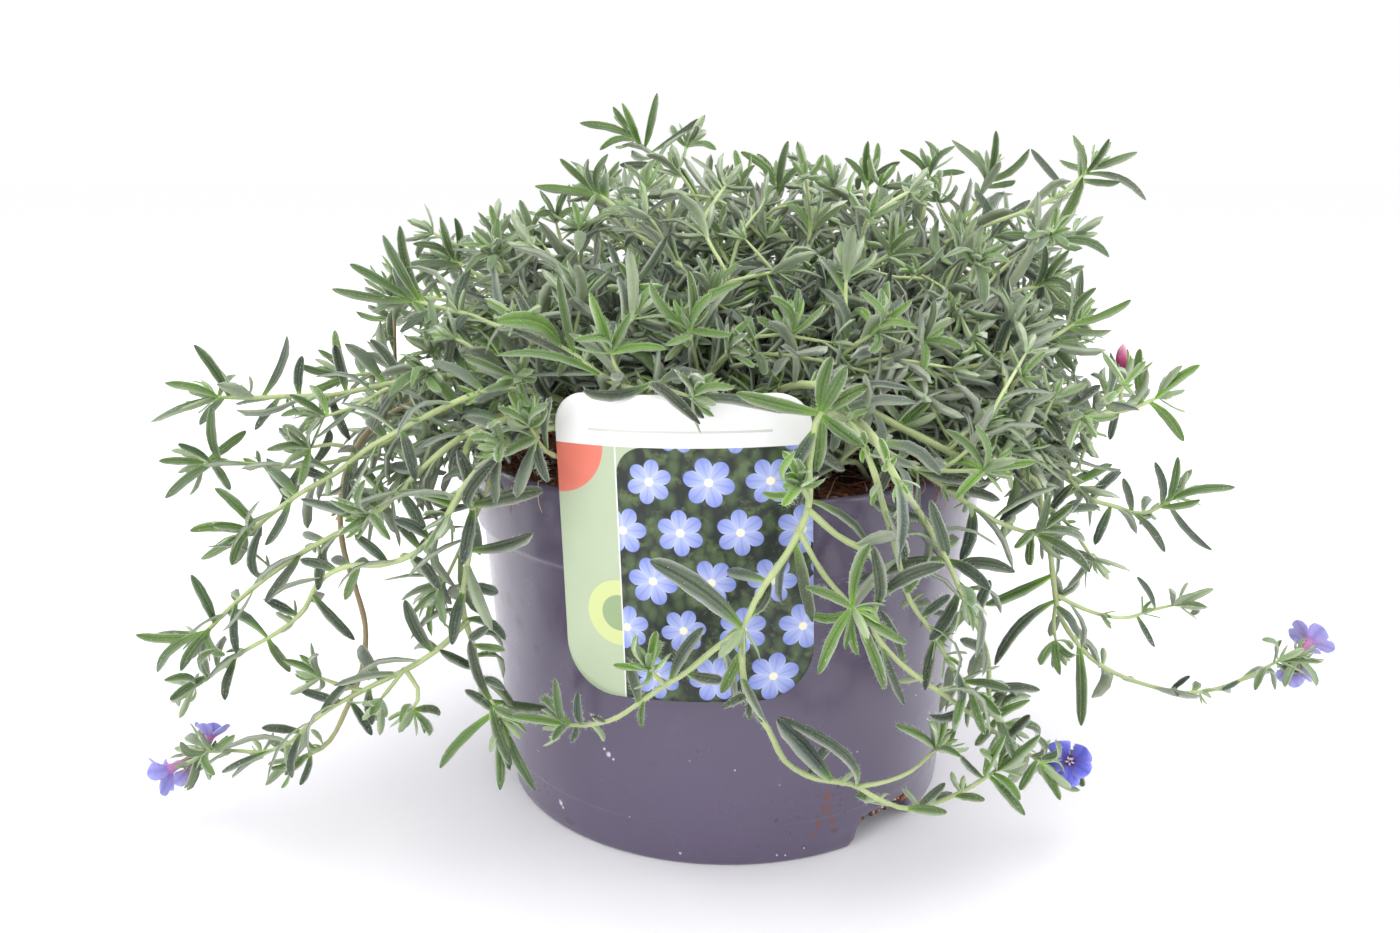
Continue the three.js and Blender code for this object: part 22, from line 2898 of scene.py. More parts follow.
{"n": "shoot_left_woody", "r": [75, 50], "o": 0, "k": 1, "f": 1, "p": [[-504,-139,1100],[-583,-113,1109],[-665,-46,1120],[-797,11,1058]],
 "l": [146,-552,-8,1168,28,9,0,0,-99,-8,-7,198,-641,-202,1165,29,6,0,0,-70,70,-17,301,-607,-73,1209,27,6,0,0,-87,30,-41,353,-701,-159,1073,32,9,0,0,-46,83,33,405,-579,48,1122,33,4,0,0,-97,11,22,456,-676,-110,1219,26,11,
0,0,-53,83,-19,560,-605,32,1226,30,10,0,0,-88,44,-17,612,-800,-125,1144,29,8,0,0,-42,90,-10,715,-788,9,1201,32,5,0,0,-52,30,-80,819,-761,107,1090,25,9,35,0,-82,-28,-50,871,-844,-45,1110,27,3,54,0,-37,62,-69,974,-841,52,
1082,27,6,91,0,-43,-15,-89]},
{"n": "shoot_right_level", "r": [75, 50], "o": 0, "k": 1, "f": 1, "p": [[724,-209,1393],[726,-253,1373],[707,-345,1377],[685,-562,1231]],
 "l": [143,729,-346,1450,31,12,0,0,13,-48,-87,189,844,-258,1272,29,6,0,0,-35,-92,-15,236,634,-322,1355,33,12,0,0,68,-65,-34,282,790,-333,1434,28,11,0,0,-37,-68,-63,328,711,-338,1252,34,10,0,0,-6,-81,59,375,644,-288,1484,
31,12,0,0,7,-98,-19,421,802,-384,1412,29,3,0,0,-83,-50,24,467,612,-368,1376,27,9,0,0,52,-66,55,514,724,-351,1517,27,12,0,0,-34,-87,-37,606,584,-401,1419,27,7,0,0,42,-82,-40,653,763,-433,1392,32,12,0,0,-64,-45,-62,977,
643,-620,1231,28,11,92,0,55,-22,-81]},
{"n": "shoot_right_fan", "r": [75, 50], "o": 0, "k": 1, "f": 1, "p": [[698,-209,1452],[761,-185,1414],[822,-159,1400],[900,-119,1239]],
 "l": [147,797,-98,1493,31,3,0,0,64,0,-77,203,745,-182,1312,34,9,0,0,95,30,10,258,856,-211,1445,33,10,0,0,27,56,-78,312,793,-50,1397,30,3,0,0,87,-28,-39,367,918,-226,1336,34,4,0,0,42,83,36,422,812,-151,1579,26,9,0,0,91,
33,-24,477,860,-65,1353,32,10,0,0,77,-18,61,588,866,-61,1436,35,9,0,0,70,-24,-68,642,838,-194,1238,31,10,0,0,80,59,-2,752,785,-51,1310,28,8,12,0,66,-8,-75,807,902,-216,1263,25,6,31,0,19,78,-60,863,937,-62,1289,29,13,51,
0,-2,-29,-96,917,839,-124,1187,28,9,71,0,90,23,-37,973,981,-142,1206,27,10,90,0,-32,51,-80]},
{"n": "shoot_back_3", "r": [75, 50], "o": 0, "k": 1, "f": 1, "p": [[-138,672,1287],[-164,726,1290],[-213,805,1311],[-250,866,1256]],
 "l": [154,-150,762,1428,32,9,0,0,-45,81,-38,222,-285,723,1231,33,13,0,0,0,96,28,289,-122,846,1304,35,13,0,0,-96,28,5,357,-262,730,1420,28,6,0,0,-24,96,-17,425,-255,866,1244,33,12,0,0,-15,31,94,492,-132,835,1421,35,4,0,
0,-76,65,-5,560,-355,769,1339,33,11,0,0,-4,99,16,628,-189,953,1254,33,11,0,0,-88,25,39,695,-278,886,1390,33,8,0,0,-28,58,-76,763,-290,829,1198,30,8,15,0,-5,100,9,831,-196,925,1273,29,13,40,0,-70,16,-69,898,-328,885,1257,
23,11,64,0,37,49,-79,966,-250,896,1179,26,12,88,0,-74,60,29]},
{"n": "shoot_back_5", "r": [75, 50], "o": 0, "k": 1, "f": 1, "p": [[304,584,1212],[350,616,1277],[395,637,1402],[461,639,1500]],
 "l": [146,275,583,1392,30,8,0,0,80,52,31,198,407,741,1278,34,12,0,0,31,-37,88,249,441,539,1370,31,12,0,0,13,89,43,301,290,683,1365,31,13,0,0,85,-4,52,353,451,650,1328,35,3,0,0,-42,2,91,405,315,526,1431,34,10,0,0,54,58,
61,456,362,776,1380,31,7,0,0,36,-34,87,508,460,571,1396,32,4,0,0,-17,54,83,560,270,653,1481,29,5,0,0,74,8,67,612,489,700,1399,33,12,0,0,-6,-16,99,664,385,541,1487,34,12,0,0,53,53,66,715,428,749,1540,35,6,0,0,58,-66,48,
767,535,580,1483,30,12,17,0,-12,48,87,819,390,631,1569,33,5,35,0,96,4,27,871,508,685,1497,23,4,54,0,1,-60,80,922,491,583,1552,24,11,72,0,42,83,37,974,473,658,1555,25,4,91,0,80,-59,-4]},
{"n": "shoot_top_left_2", "r": [75, 50], "o": 0, "k": 1, "f": 1, "p": [[-183,-13,1135],[-130,-30,1220],[-53,-56,1366],[87,-34,1415]],
 "l": [143,-112,79,1228,31,4,0,0,40,-61,68,189,-89,-110,1196,29,4,0,0,24,35,91,236,-171,-18,1338,35,3,0,0,94,-30,16,282,-31,-3,1257,29,5,0,0,-29,-51,81,328,-127,-156,1328,28,12,0,0,65,51,56,375,-124,49,1312,35,10,0,0,47,
-59,65,421,10,-119,1324,29,10,0,0,-30,29,91,467,-150,-69,1390,28,12,0,0,93,-3,37,514,-4,22,1375,30,10,0,0,-6,-69,72,560,-44,-149,1370,26,13,0,0,31,50,81,606,-89,-15,1503,35,12,0,0,90,-38,19,653,88,-12,1360,26,6,0,0,10,
-30,95,699,26,-149,1491,30,10,0,0,75,66,9,745,23,74,1475,28,6,9,0,90,-42,12,792,119,-92,1332,32,12,26,0,50,45,74,838,89,-49,1496,24,6,42,0,77,29,-57,884,105,35,1388,28,6,59,0,71,-54,45,931,158,-74,1432,21,11,75,0,32,95,
3,977,137,1,1473,22,4,92,0,77,-32,-55]},
{"n": "shoot_top_centre", "r": [75, 50], "o": 0, "k": 1, "f": 1, "p": [[22,-65,1152],[11,-78,1188],[6,-93,1247],[-47,-104,1277]],
 "l": [164,-93,-37,1228,32,8,0,0,22,-63,75,252,60,-81,1283,28,3,0,0,-84,-42,35,340,-26,-204,1251,34,4,0,0,7,43,90,428,-47,-67,1298,29,5,0,0,67,-55,49,516,99,-95,1321,27,3,0,0,-73,-30,62,604,-122,-108,1274,30,4,0,0,29,
-21,93,692,26,-90,1414,31,4,0,0,-94,-30,14,780,-88,-181,1237,32,7,21,0,-56,33,76,868,-105,-22,1320,26,10,53,0,-65,-75,11,956,-75,-148,1332,24,6,84,0,-88,42,-21]},
{"n": "shoot_top_front", "r": [75, 50], "o": 0, "k": 1, "f": 1, "p": [[192,-170,1350],[237,-255,1335],[296,-403,1315],[261,-562,1242]],
 "l": [142,117,-332,1303,29,6,0,0,82,-57,-6,186,297,-272,1419,27,12,0,0,11,-73,-67,230,291,-281,1207,35,11,0,0,25,-84,49,274,177,-379,1416,28,10,0,0,72,-51,-47,318,343,-273,1354,30,4,0,0,-15,-95,-27,362,220,-372,1259,29,
12,0,0,78,-46,42,406,270,-332,1430,31,4,0,0,42,-78,-47,450,362,-308,1259,33,5,0,0,9,-97,22,494,168,-446,1346,28,9,0,0,76,-64,-13,538,395,-384,1414,35,13,0,0,1,-90,-44,582,303,-458,1187,27,13,0,0,35,-75,56,626,253,-523,
1408,29,6,0,0,45,-57,-69,670,451,-457,1284,35,5,0,0,-36,-90,-25,714,206,-476,1245,30,5,0,0,52,-85,-5,758,301,-563,1370,26,12,14,0,-23,-51,-83,802,333,-498,1180,29,5,29,0,-50,-87,5,846,182,-566,1276,27,13,45,0,49,-61,-63,
890,322,-610,1272,23,10,61,0,-71,-35,-61,934,222,-577,1171,25,5,76,0,19,-90,39,978,232,-627,1264,23,8,92,0,12,-27,-96]},
{"n": "shoot_left_mid", "r": [75, 50], "o": 0, "k": 1, "f": 1, "p": [[-344,-254,1039],[-395,-250,1092],[-468,-254,1191],[-553,-187,1213]],
 "l": [267,-518,-218,1091,33,9,0,0,5,-20,98,325,-378,-208,1204,34,12,0,0,-93,-28,23,384,-453,-337,1162,32,6,0,0,-36,65,67,443,-517,-157,1169,30,5,0,0,-18,-57,80,501,-393,-290,1275,29,6,0,0,-95,9,29,560,-577,-301,1184,35,
4,0,0,7,24,97,619,-445,-145,1298,35,9,0,0,-87,-31,38,677,-564,-328,1277,28,10,0,0,-47,85,24,736,-523,-136,1143,29,6,6,0,-74,9,66,795,-528,-193,1319,30,9,27,0,-76,53,-37,853,-616,-222,1171,26,6,48,0,-17,90,41,912,-541,
-132,1220,26,7,69,0,-99,-14,-5,971,-608,-185,1264,25,4,90,0,-30,83,-47]},
{"n": "shoot_back_1", "r": [75, 50], "o": 0, "k": 1, "f": 1, "p": [[-390,332,1150],[-445,276,1174],[-501,200,1220],[-577,-14,1159]],
 "l": [143,-541,351,1189,28,5,0,0,-27,-95,17,189,-404,232,1247,35,5,0,0,-90,-41,-15,236,-532,199,1095,33,11,0,0,-28,-36,89,282,-531,278,1295,35,10,0,0,-32,-90,-29,328,-431,168,1204,30,8,0,0,-96,-4,27,375,-569,261,1186,
35,7,0,0,8,-74,67,421,-450,242,1316,33,5,0,0,-80,-60,-3,467,-517,137,1210,31,7,0,0,-34,26,90,514,-553,294,1267,28,3,0,0,-24,-89,39,560,-429,161,1283,28,12,0,0,-87,-47,15,606,-573,152,1169,31,5,0,0,5,-61,79,653,-557,162,
1338,33,8,0,0,-26,-86,-45,699,-468,88,1183,27,8,0,0,-90,-42,15,745,-651,154,1187,28,7,9,0,7,-99,-16,792,-519,6,1267,27,9,26,0,-49,-41,-77,838,-542,53,1116,32,7,42,0,-40,-79,46,884,-628,12,1220,26,11,59,0,21,-73,-65,931,
-525,-70,1165,28,4,75,0,-89,-28,-37,977,-628,-53,1117,21,3,92,0,48,-80,36]},
{"n": "shoot_back_7", "r": [75, 50], "o": 0, "k": 1, "f": 1, "p": [[695,323,1329],[771,303,1311],[848,294,1328],[962,173,1183]],
 "l": [146,790,246,1426,31,4,0,0,83,-12,-55,198,826,408,1265,34,11,0,0,73,-68,-9,249,800,171,1274,35,3,0,0,94,34,-6,301,883,336,1423,30,7,0,0,68,-41,-61,353,900,320,1242,30,6,0,0,49,-25,83,405,836,226,1412,36,6,0,0,83,
55,0,456,813,408,1371,27,7,0,0,87,-31,39,508,943,245,1321,27,4,0,0,28,55,79,560,847,295,1462,35,12,0,0,98,-8,-21,612,940,341,1271,28,8,0,0,50,-80,35,664,819,134,1321,36,4,0,0,88,-13,-46,715,973,264,1323,33,11,0,0,-3,-56,
-83,767,868,262,1180,26,4,17,0,74,-67,-5,819,932,132,1279,33,9,35,0,39,7,-92,871,1015,231,1183,27,10,54,0,-22,-88,-43,922,910,151,1165,22,8,72,0,95,-14,-28,974,1033,118,1190,26,8,91,0,-15,-11,-98]},
{"n": "shoot_top_left_2", "r": [75, 50], "o": 0, "k": 1, "f": 1, "p": [[-219,-209,1401],[-200,-269,1416],[-153,-366,1446],[-66,-463,1379]],
 "l": [147,-278,-379,1388,35,6,0,0,80,-42,42,203,-156,-312,1552,31,11,0,0,11,-88,-47,258,-116,-347,1349,31,9,0,0,-15,-64,75,312,-269,-349,1479,28,12,0,0,77,-64,-4,367,-65,-302,1511,32,6,0,0,-19,-98,0,422,-180,-450,1396,
35,6,0,0,48,-13,87,477,-208,-325,1555,36,5,0,0,49,-87,-2,532,-28,-348,1409,34,4,0,0,-4,-88,47,588,-231,-473,1452,29,12,0,0,89,-43,17,642,-41,-411,1559,35,8,0,0,15,-83,-54,698,-110,-403,1338,28,4,0,0,49,-79,37,752,-127,
-494,1470,32,6,12,0,67,-20,-71,807,-25,-417,1398,24,13,31,0,-22,-87,-45,863,-116,-512,1314,24,7,51,0,98,-17,3,917,-14,-511,1414,25,5,71,0,8,-14,-99,973,-17,-479,1329,21,12,90,0,-8,-94,33]},
{"n": "shoot_left_top", "r": [75, 50], "o": 0, "k": 1, "f": 1, "p": [[-262,-274,1307],[-293,-308,1322],[-329,-363,1365],[-419,-418,1299]],
 "l": [157,-391,-286,1401,36,6,0,0,-19,-96,-22,230,-209,-433,1383,32,4,0,0,-90,-40,16,303,-412,-356,1296,31,4,0,0,11,-62,78,377,-297,-294,1452,28,5,0,0,-47,-87,14,450,-263,-495,1351,35,4,0,0,-57,-8,82,523,-431,-321,1403,
30,4,0,0,9,-85,51,597,-278,-406,1452,33,3,0,0,-83,-55,2,670,-381,-398,1274,27,10,0,0,-60,-58,56,743,-463,-370,1420,30,9,8,0,-42,-56,-72,817,-395,-500,1286,27,5,35,0,-83,41,-37,890,-450,-370,1260,28,7,61,0,-31,-94,-13,
963,-480,-469,1321,26,10,87,0,-23,4,-97]},
{"n": "shoot_right_long", "r": [75, 50], "o": 0, "k": 1, "f": 1, "p": [[298,-382,1046],[260,-428,1125],[210,-479,1252],[113,-608,1289]],
 "l": [143,356,-382,1229,35,6,0,0,-68,-61,41,189,230,-542,1096,34,7,0,0,-23,15,96,236,204,-372,1185,28,6,0,0,-2,-90,43,282,308,-483,1192,27,8,0,0,-91,-6,42,375,271,-392,1241,33,3,0,0,-54,-75,39,421,254,-563,1200,27,5,0,
0,-35,29,89,467,121,-374,1251,29,5,0,0,16,-57,80,514,338,-461,1298,33,6,0,0,-70,-27,67,560,131,-565,1276,36,7,0,0,23,30,93,606,181,-427,1333,32,8,0,0,-23,-94,26,653,262,-574,1294,34,4,0,0,-85,-19,49,699,74,-519,1251,35,
5,0,0,13,-71,69,745,182,-537,1417,26,5,9,0,-63,-75,-20,838,30,-541,1326,30,6,42,0,-3,-100,-9,884,162,-647,1337,29,12,59,0,-89,-34,-31,931,66,-647,1259,29,10,75,0,11,-42,90,977,80,-631,1329,22,8,92,0,-16,-71,-68]},
{"n": "shoot_back_9", "r": [75, 50], "o": 0, "k": 1, "f": 1, "p": [[-131,335,1131],[-131,387,1137],[-138,451,1148],[-119,557,1079]],
 "l": [222,-105,439,1261,31,6,0,0,-12,88,-47,289,-234,467,1100,35,7,0,0,52,77,37,357,-20,461,1148,28,7,0,0,-54,81,22,425,-186,441,1234,30,13,0,0,21,94,-27,492,-162,523,1105,34,6,0,0,0,36,93,560,-47,504,1273,27,6,0,0,-43,
87,-23,628,-240,502,1154,33,7,0,0,49,85,-18,695,-45,483,1060,28,5,0,0,-31,95,-7,763,-125,577,1165,25,10,15,0,11,29,-95,898,-44,601,1067,25,5,64,0,-68,45,-57,966,-148,612,1084,26,7,88,0,61,21,-76]},
{"n": "shoot_left_top", "r": [75, 50], "o": 0, "k": 1, "f": 1, "p": [[-237,-177,1187],[-250,-178,1242],[-268,-160,1338],[-300,-117,1398]],
 "l": [154,-284,-291,1311,30,12,0,0,-9,68,72,222,-313,-57,1315,34,6,0,0,2,-61,80,289,-193,-250,1363,28,7,0,0,-64,52,56,357,-348,-144,1301,33,5,0,0,46,-9,88,425,-155,-132,1356,26,6,0,0,-65,-6,75,492,-333,-245,1391,28,9,0,
0,28,68,68,560,-275,-76,1368,33,9,0,0,-12,-55,82,628,-223,-205,1444,27,6,0,0,-60,66,45,695,-362,-125,1396,32,5,0,0,54,28,79,763,-196,-42,1427,28,4,15,0,-76,17,62,831,-348,-177,1484,24,12,40,0,-15,96,23,898,-333,-60,1404,
22,8,64,0,6,-28,96,966,-289,-94,1460,22,9,88,0,-87,48,-9]},
{"n": "shoot_right_fan", "r": [75, 50], "o": 0, "k": 1, "f": 1, "p": [[575,-255,1453],[607,-261,1447],[671,-277,1447],[708,-281,1364]],
 "l": [160,692,-169,1528,34,3,0,0,75,-44,-50,240,660,-301,1293,34,6,0,0,92,-6,40,400,743,-168,1449,32,8,0,0,60,-78,20,480,720,-402,1434,28,6,0,0,81,48,34,640,695,-236,1333,31,12,0,0,89,-44,7,720,739,-401,1431,32,6,0,0,
41,25,-88,800,766,-159,1373,32,3,29,0,15,-44,-89,880,653,-317,1317,22,4,57,0,78,29,-55,960,763,-294,1332,28,7,86,0,-54,20,-82]},
{"n": "shoot_right_drop", "r": [75, 50], "o": 0, "k": 1, "f": 1, "p": [[622,-406,1141],[676,-404,1191],[730,-396,1294],[775,-378,1398]],
 "l": [147,771,-503,1184,31,13,0,0,34,61,71,203,611,-380,1323,28,3,0,0,96,-5,28,258,798,-343,1202,26,8,0,0,3,-43,90,367,659,-297,1296,34,6,0,0,71,-38,59,422,847,-430,1279,27,13,0,0,-33,27,91,532,781,-297,1338,35,9,0,0,
13,-69,71,807,743,-308,1427,33,5,31,0,66,-53,54,863,869,-402,1412,27,3,51,0,-37,38,85,917,746,-392,1481,24,9,71,0,89,42,18,973,802,-342,1435,25,11,90,0,-7,-75,66]},
{"n": "shoot_top_centre", "r": [75, 50], "o": 0, "k": 1, "f": 1, "p": [[26,-73,1170],[55,-26,1219],[95,42,1311],[146,218,1294]],
 "l": [146,62,71,1151,33,6,0,0,38,20,90,198,160,-108,1308,34,13,0,0,10,92,39,249,-31,23,1269,35,3,0,0,76,44,48,301,165,34,1195,32,10,0,0,-9,40,91,353,49,-76,1345,31,11,0,0,42,82,38,405,60,80,1293,33,13,0,0,52,-41,75,456,
178,-25,1333,31,4,0,0,-35,68,64,508,-19,9,1395,29,7,0,0,70,50,51,560,150,144,1258,26,6,0,0,11,16,98,612,171,-32,1436,30,7,0,0,15,94,30,664,2,160,1349,27,12,0,0,80,55,23,715,247,104,1241,29,4,0,0,-11,94,33,767,127,197,
1417,34,9,17,0,27,64,-72,819,86,205,1234,30,3,35,0,65,61,45,871,203,207,1318,28,12,54,0,-53,74,-41,922,117,250,1319,23,11,72,0,74,31,-60,974,177,274,1251,24,10,91,0,-21,60,77]},
{"n": "shoot_left_mid", "r": [75, 50], "o": 0, "k": 1, "f": 1, "p": [[-418,-323,1150],[-477,-282,1161],[-537,-181,1194],[-631,-45,1122]],
 "l": [144,-571,-349,1174,29,10,0,0,-30,95,3,193,-478,-196,1119,33,4,0,0,-90,-7,43,242,-497,-297,1310,33,9,0,0,-75,64,-18,291,-571,-266,1109,29,8,0,0,-16,73,67,340,-431,-147,1233,29,13,0,0,-95,33,2,389,-582,-265,1249,29,
3,0,0,-1,100,-7,438,-523,-118,1114,34,10,0,0,-44,28,85,487,-495,-184,1303,32,4,0,0,-64,71,-29,536,-648,-201,1181,34,11,0,0,15,90,41,584,-473,-60,1192,34,7,0,0,-93,29,23,633,-603,-149,1274,27,8,0,0,-17,79,-59,682,-589,
-151,1081,30,9,0,0,-39,85,36,731,-529,-16,1242,29,3,4,0,-72,36,-59,780,-719,-139,1178,28,5,21,0,-1,89,-46,829,-544,-58,1080,31,7,39,0,-85,52,0,878,-645,-17,1204,23,6,56,0,-29,38,-88,927,-687,-69,1063,22,4,74,0,1,100,8,
976,-631,24,1107,21,3,91,0,-89,-20,-42]},
{"n": "shoot_back_1", "r": [75, 50], "o": 0, "k": 1, "f": 1, "p": [[-351,307,1066],[-377,337,1091],[-409,388,1126],[-463,447,1120]],
 "l": [160,-330,341,1222,28,5,0,0,-77,63,8,240,-495,356,1114,30,8,0,0,31,76,57,320,-335,472,1127,26,13,0,0,-87,13,47,400,-436,318,1229,27,12,0,0,-26,96,9,480,-487,485,1091,32,9,0,0,5,18,98,560,-358,460,1239,28,8,0,0,-88,
47,-6,640,-555,396,1182,33,6,0,0,11,99,6,720,-425,532,1063,30,11,0,0,-87,17,47,800,-481,466,1196,29,6,29,0,-45,50,-74,880,-525,453,1077,30,12,57,0,5,90,44,960,-466,543,1129,28,13,86,0,-95,-7,-30]},
{"n": "shoot_right_drop", "r": [75, 50], "o": 0, "k": 1, "f": 1, "p": [[723,-437,1085],[784,-444,1090],[866,-464,1138],[971,-478,1203]],
 "l": [149,841,-462,1196,31,7,0,0,77,0,-63,208,890,-364,1036,33,12,0,0,57,-71,42,267,822,-558,1109,31,4,0,0,90,42,12,325,842,-387,1192,34,12,0,0,83,-54,-18,384,913,-480,1030,26,8,0,0,46,-9,88,501,932,-331,1154,33,3,0,0,
58,-67,45,619,843,-440,1240,32,10,0,0,95,-28,14,971,1020,-447,1216,21,13,90,0,25,-82,52]},
{"n": "shoot_centre_right", "r": [75, 50], "o": 0, "k": 1, "f": 1, "p": [[138,-282,1269],[203,-329,1284],[286,-416,1352],[461,-379,1387]],
 "l": [144,231,-409,1187,33,11,0,0,74,-7,66,193,182,-354,1410,29,12,0,0,86,-47,-21,242,335,-300,1260,27,4,0,0,12,-90,42,291,173,-466,1294,34,11,0,0,95,-11,30,340,285,-319,1422,26,9,0,0,42,-89,-18,389,289,-423,1233,30,5,
0,0,22,-44,87,438,174,-419,1406,30,5,0,0,82,-57,6,487,373,-369,1379,28,5,0,0,-12,-94,31,536,263,-531,1325,27,11,0,0,67,8,74,584,284,-416,1483,29,6,0,0,75,-64,-18,633,433,-388,1324,30,12,0,0,20,-63,75,682,317,-560,1410,
35,5,0,0,94,25,22,731,380,-347,1439,30,4,4,0,84,-47,-28,780,441,-409,1326,32,3,21,0,33,30,89,829,434,-421,1452,29,9,39,0,70,50,-50,878,444,-297,1374,30,10,56,0,87,-44,22,927,500,-414,1380,26,6,74,0,28,92,27,976,499,-350,
1448,23,7,91,0,79,-7,-61]},
{"n": "shoot_top_left", "r": [75, 50], "o": 0, "k": 1, "f": 1, "p": [[-107,168,1106],[-138,108,1180],[-180,39,1321],[-251,-107,1325]],
 "l": [143,-239,195,1231,30,7,0,0,0,-88,48,189,-53,60,1247,29,10,0,0,-87,-37,33,236,-238,30,1173,34,10,0,0,31,-16,94,282,-145,141,1282,26,7,0,0,-32,-94,16,328,-111,-32,1254,34,7,0,0,-63,27,72,375,-254,105,1277,34,4,0,0,
47,-58,67,421,-82,96,1320,34,8,0,0,-74,-46,49,467,-216,-33,1273,28,6,0,0,8,24,97,514,-210,169,1371,32,13,0,0,-5,-78,63,560,-71,-34,1372,35,13,0,0,-72,-7,69,606,-283,15,1316,35,8,0,0,26,-42,87,653,-182,18,1487,28,5,0,0,
-50,-85,-14,699,-190,-126,1311,28,6,0,0,-66,-6,75,745,-334,14,1378,30,9,9,0,-3,-100,0,792,-156,-95,1398,30,6,26,0,-71,-64,-30,838,-282,-110,1238,31,10,42,0,-10,-73,68,884,-301,-114,1413,31,8,59,0,-9,-77,-64,931,-206,
-181,1307,23,6,75,0,-96,-29,6,977,-323,-141,1313,25,13,92,0,47,-87,15]},
{"n": "shoot_back_4", "r": [75, 50], "o": 0, "k": 1, "f": 1, "p": [[80,585,1207],[69,617,1224],[48,659,1265],[13,693,1270]],
 "l": [164,-37,655,1255,30,4,0,0,50,82,26,252,103,721,1232,31,10,0,0,-77,13,63,340,56,582,1360,28,8,0,0,-31,93,21,428,-24,713,1242,28,6,0,0,31,25,92,516,155,711,1341,36,8,0,0,-77,47,43,604,-59,618,1362,33,12,0,0,-2,96,
28,692,-3,790,1227,28,7,0,0,-50,7,86,780,10,729,1347,31,12,21,0,-71,43,-56,868,-92,689,1245,27,5,53,0,2,97,23,956,-3,766,1270,22,10,84,0,-96,-26,4]},
{"n": "shoot_top_left_2", "r": [75, 50], "o": 0, "k": 1, "f": 1, "p": [[-181,17,1069],[-149,22,1140],[-95,42,1240],[-17,92,1313]],
 "l": [147,-202,10,1204,27,11,0,0,93,16,32,203,-78,119,1150,34,12,0,0,7,-42,91,258,-103,-62,1219,28,11,0,0,19,80,57,312,-200,89,1241,29,5,0,0,82,-23,52,367,-12,48,1191,27,12,0,0,-30,0,95,422,-169,-44,1258,32,10,0,0,65,
48,59,477,-121,164,1238,32,6,0,0,46,-35,81,532,-24,-8,1270,28,11,0,0,-25,66,71,588,-153,44,1334,30,7,0,0,92,22,32,642,-3,135,1278,30,12,0,0,1,-43,90,698,-23,-44,1341,29,11,0,0,43,78,45,752,-112,148,1342,32,7,12,0,93,3,
36,807,50,94,1282,27,12,31,0,-18,38,91,863,-4,80,1404,27,10,51,0,66,68,-31,917,-1,163,1323,25,11,71,0,65,-47,59,973,55,89,1357,27,4,90,0,-18,95,27]},
{"n": "shoot_back_11", "r": [75, 50], "o": 0, "k": 1, "f": 1, "p": [[-398,-62,1261],[-367,-157,1263],[-349,-259,1302],[-312,-408,1274]],
 "l": [193,-400,-189,1370,30,8,0,0,44,-79,-43,242,-270,-150,1234,30,7,0,0,-14,-98,17,291,-473,-265,1246,28,7,0,0,73,-65,20,340,-316,-183,1367,35,10,0,0,1,-97,-23,389,-319,-263,1204,29,5,0,0,-4,-59,81,438,-480,-225,1397,
35,4,0,0,47,-86,18,487,-235,-275,1369,31,10,0,0,-58,-80,14,536,-414,-374,1269,31,6,0,0,58,-30,76,584,-361,-251,1469,31,6,0,0,19,-98,-11,633,-263,-284,1245,29,3,0,0,-15,-91,38,682,-460,-351,1323,29,5,0,0,60,-80,-5,731,
-242,-372,1375,28,6,4,0,-27,-79,-56,829,-353,-433,1350,32,7,39,0,49,-49,-72,878,-247,-415,1268,29,3,56,0,-64,-76,-14,927,-354,-434,1250,26,8,74,0,84,-53,12,976,-282,-471,1315,24,7,91,0,-7,-48,-87]},
{"n": "shoot_right_front_1", "r": [75, 50], "o": 0, "k": 1, "f": 1, "p": [[489,-733,1105],[566,-708,1156],[645,-667,1283],[731,-535,1355]],
 "l": [189,560,-654,1238,27,8,0,0,98,-14,-16,236,641,-682,1085,32,12,0,0,42,14,90,282,596,-773,1271,27,7,0,0,72,69,9,328,567,-574,1212,30,11,0,0,75,-27,60,375,721,-759,1215,34,7,0,0,-5,57,82,421,513,-704,1309,33,9,0,0,
84,20,51,467,690,-607,1262,32,5,0,0,-5,-50,87,606,773,-626,1269,31,5,0,0,-12,20,97,699,647,-494,1337,29,6,0,0,81,-12,57,977,801,-484,1357,22,7,92,0,-48,51,72]},
{"n": "shoot_centre_right", "r": [75, 50], "o": 0, "k": 1, "f": 1, "p": [[135,-217,1278],[135,-230,1328],[141,-240,1400],[137,-225,1474]],
 "l": [157,22,-256,1374,35,4,0,0,57,-17,80,230,199,-157,1410,34,4,0,0,-33,-66,68,303,166,-342,1374,29,7,0,0,-13,38,92,377,34,-208,1439,35,10,0,0,62,-36,70,450,261,-177,1428,28,13,0,0,-33,-42,85,523,124,-359,1479,31,3,0,
0,25,64,73,597,97,-181,1488,36,5,0,0,50,-65,57,670,73,-150,1496,31,5,0,0,43,-49,76,743,250,-213,1532,28,7,8,0,-73,6,68,817,93,-270,1514,29,5,35,0,41,72,55,890,130,-158,1515,23,4,61,0,-1,-67,74,963,172,-250,1556,28,9,87,
0,-60,69,41]},
{"n": "shoot_top_fan", "r": [75, 50], "o": 0, "k": 1, "f": 1, "p": [[-51,-293,1213],[21,-302,1250],[125,-284,1312],[251,-261,1318]],
 "l": [147,35,-395,1278,35,8,0,0,80,57,20,203,50,-240,1344,35,10,0,0,81,-57,-12,258,131,-325,1165,30,13,0,0,50,1,86,312,18,-360,1347,33,12,0,0,96,24,13,367,90,-166,1295,29,7,0,0,74,-46,48,422,165,-408,1259,29,7,0,0,52,
52,68,477,71,-274,1393,30,13,0,0,100,4,-8,532,169,-225,1257,34,5,0,0,47,-20,86,588,173,-362,1380,29,8,0,0,66,75,6,642,128,-141,1405,33,7,0,0,98,-17,14,698,241,-308,1256,27,6,0,0,52,43,74,752,240,-290,1424,31,11,12,0,76,
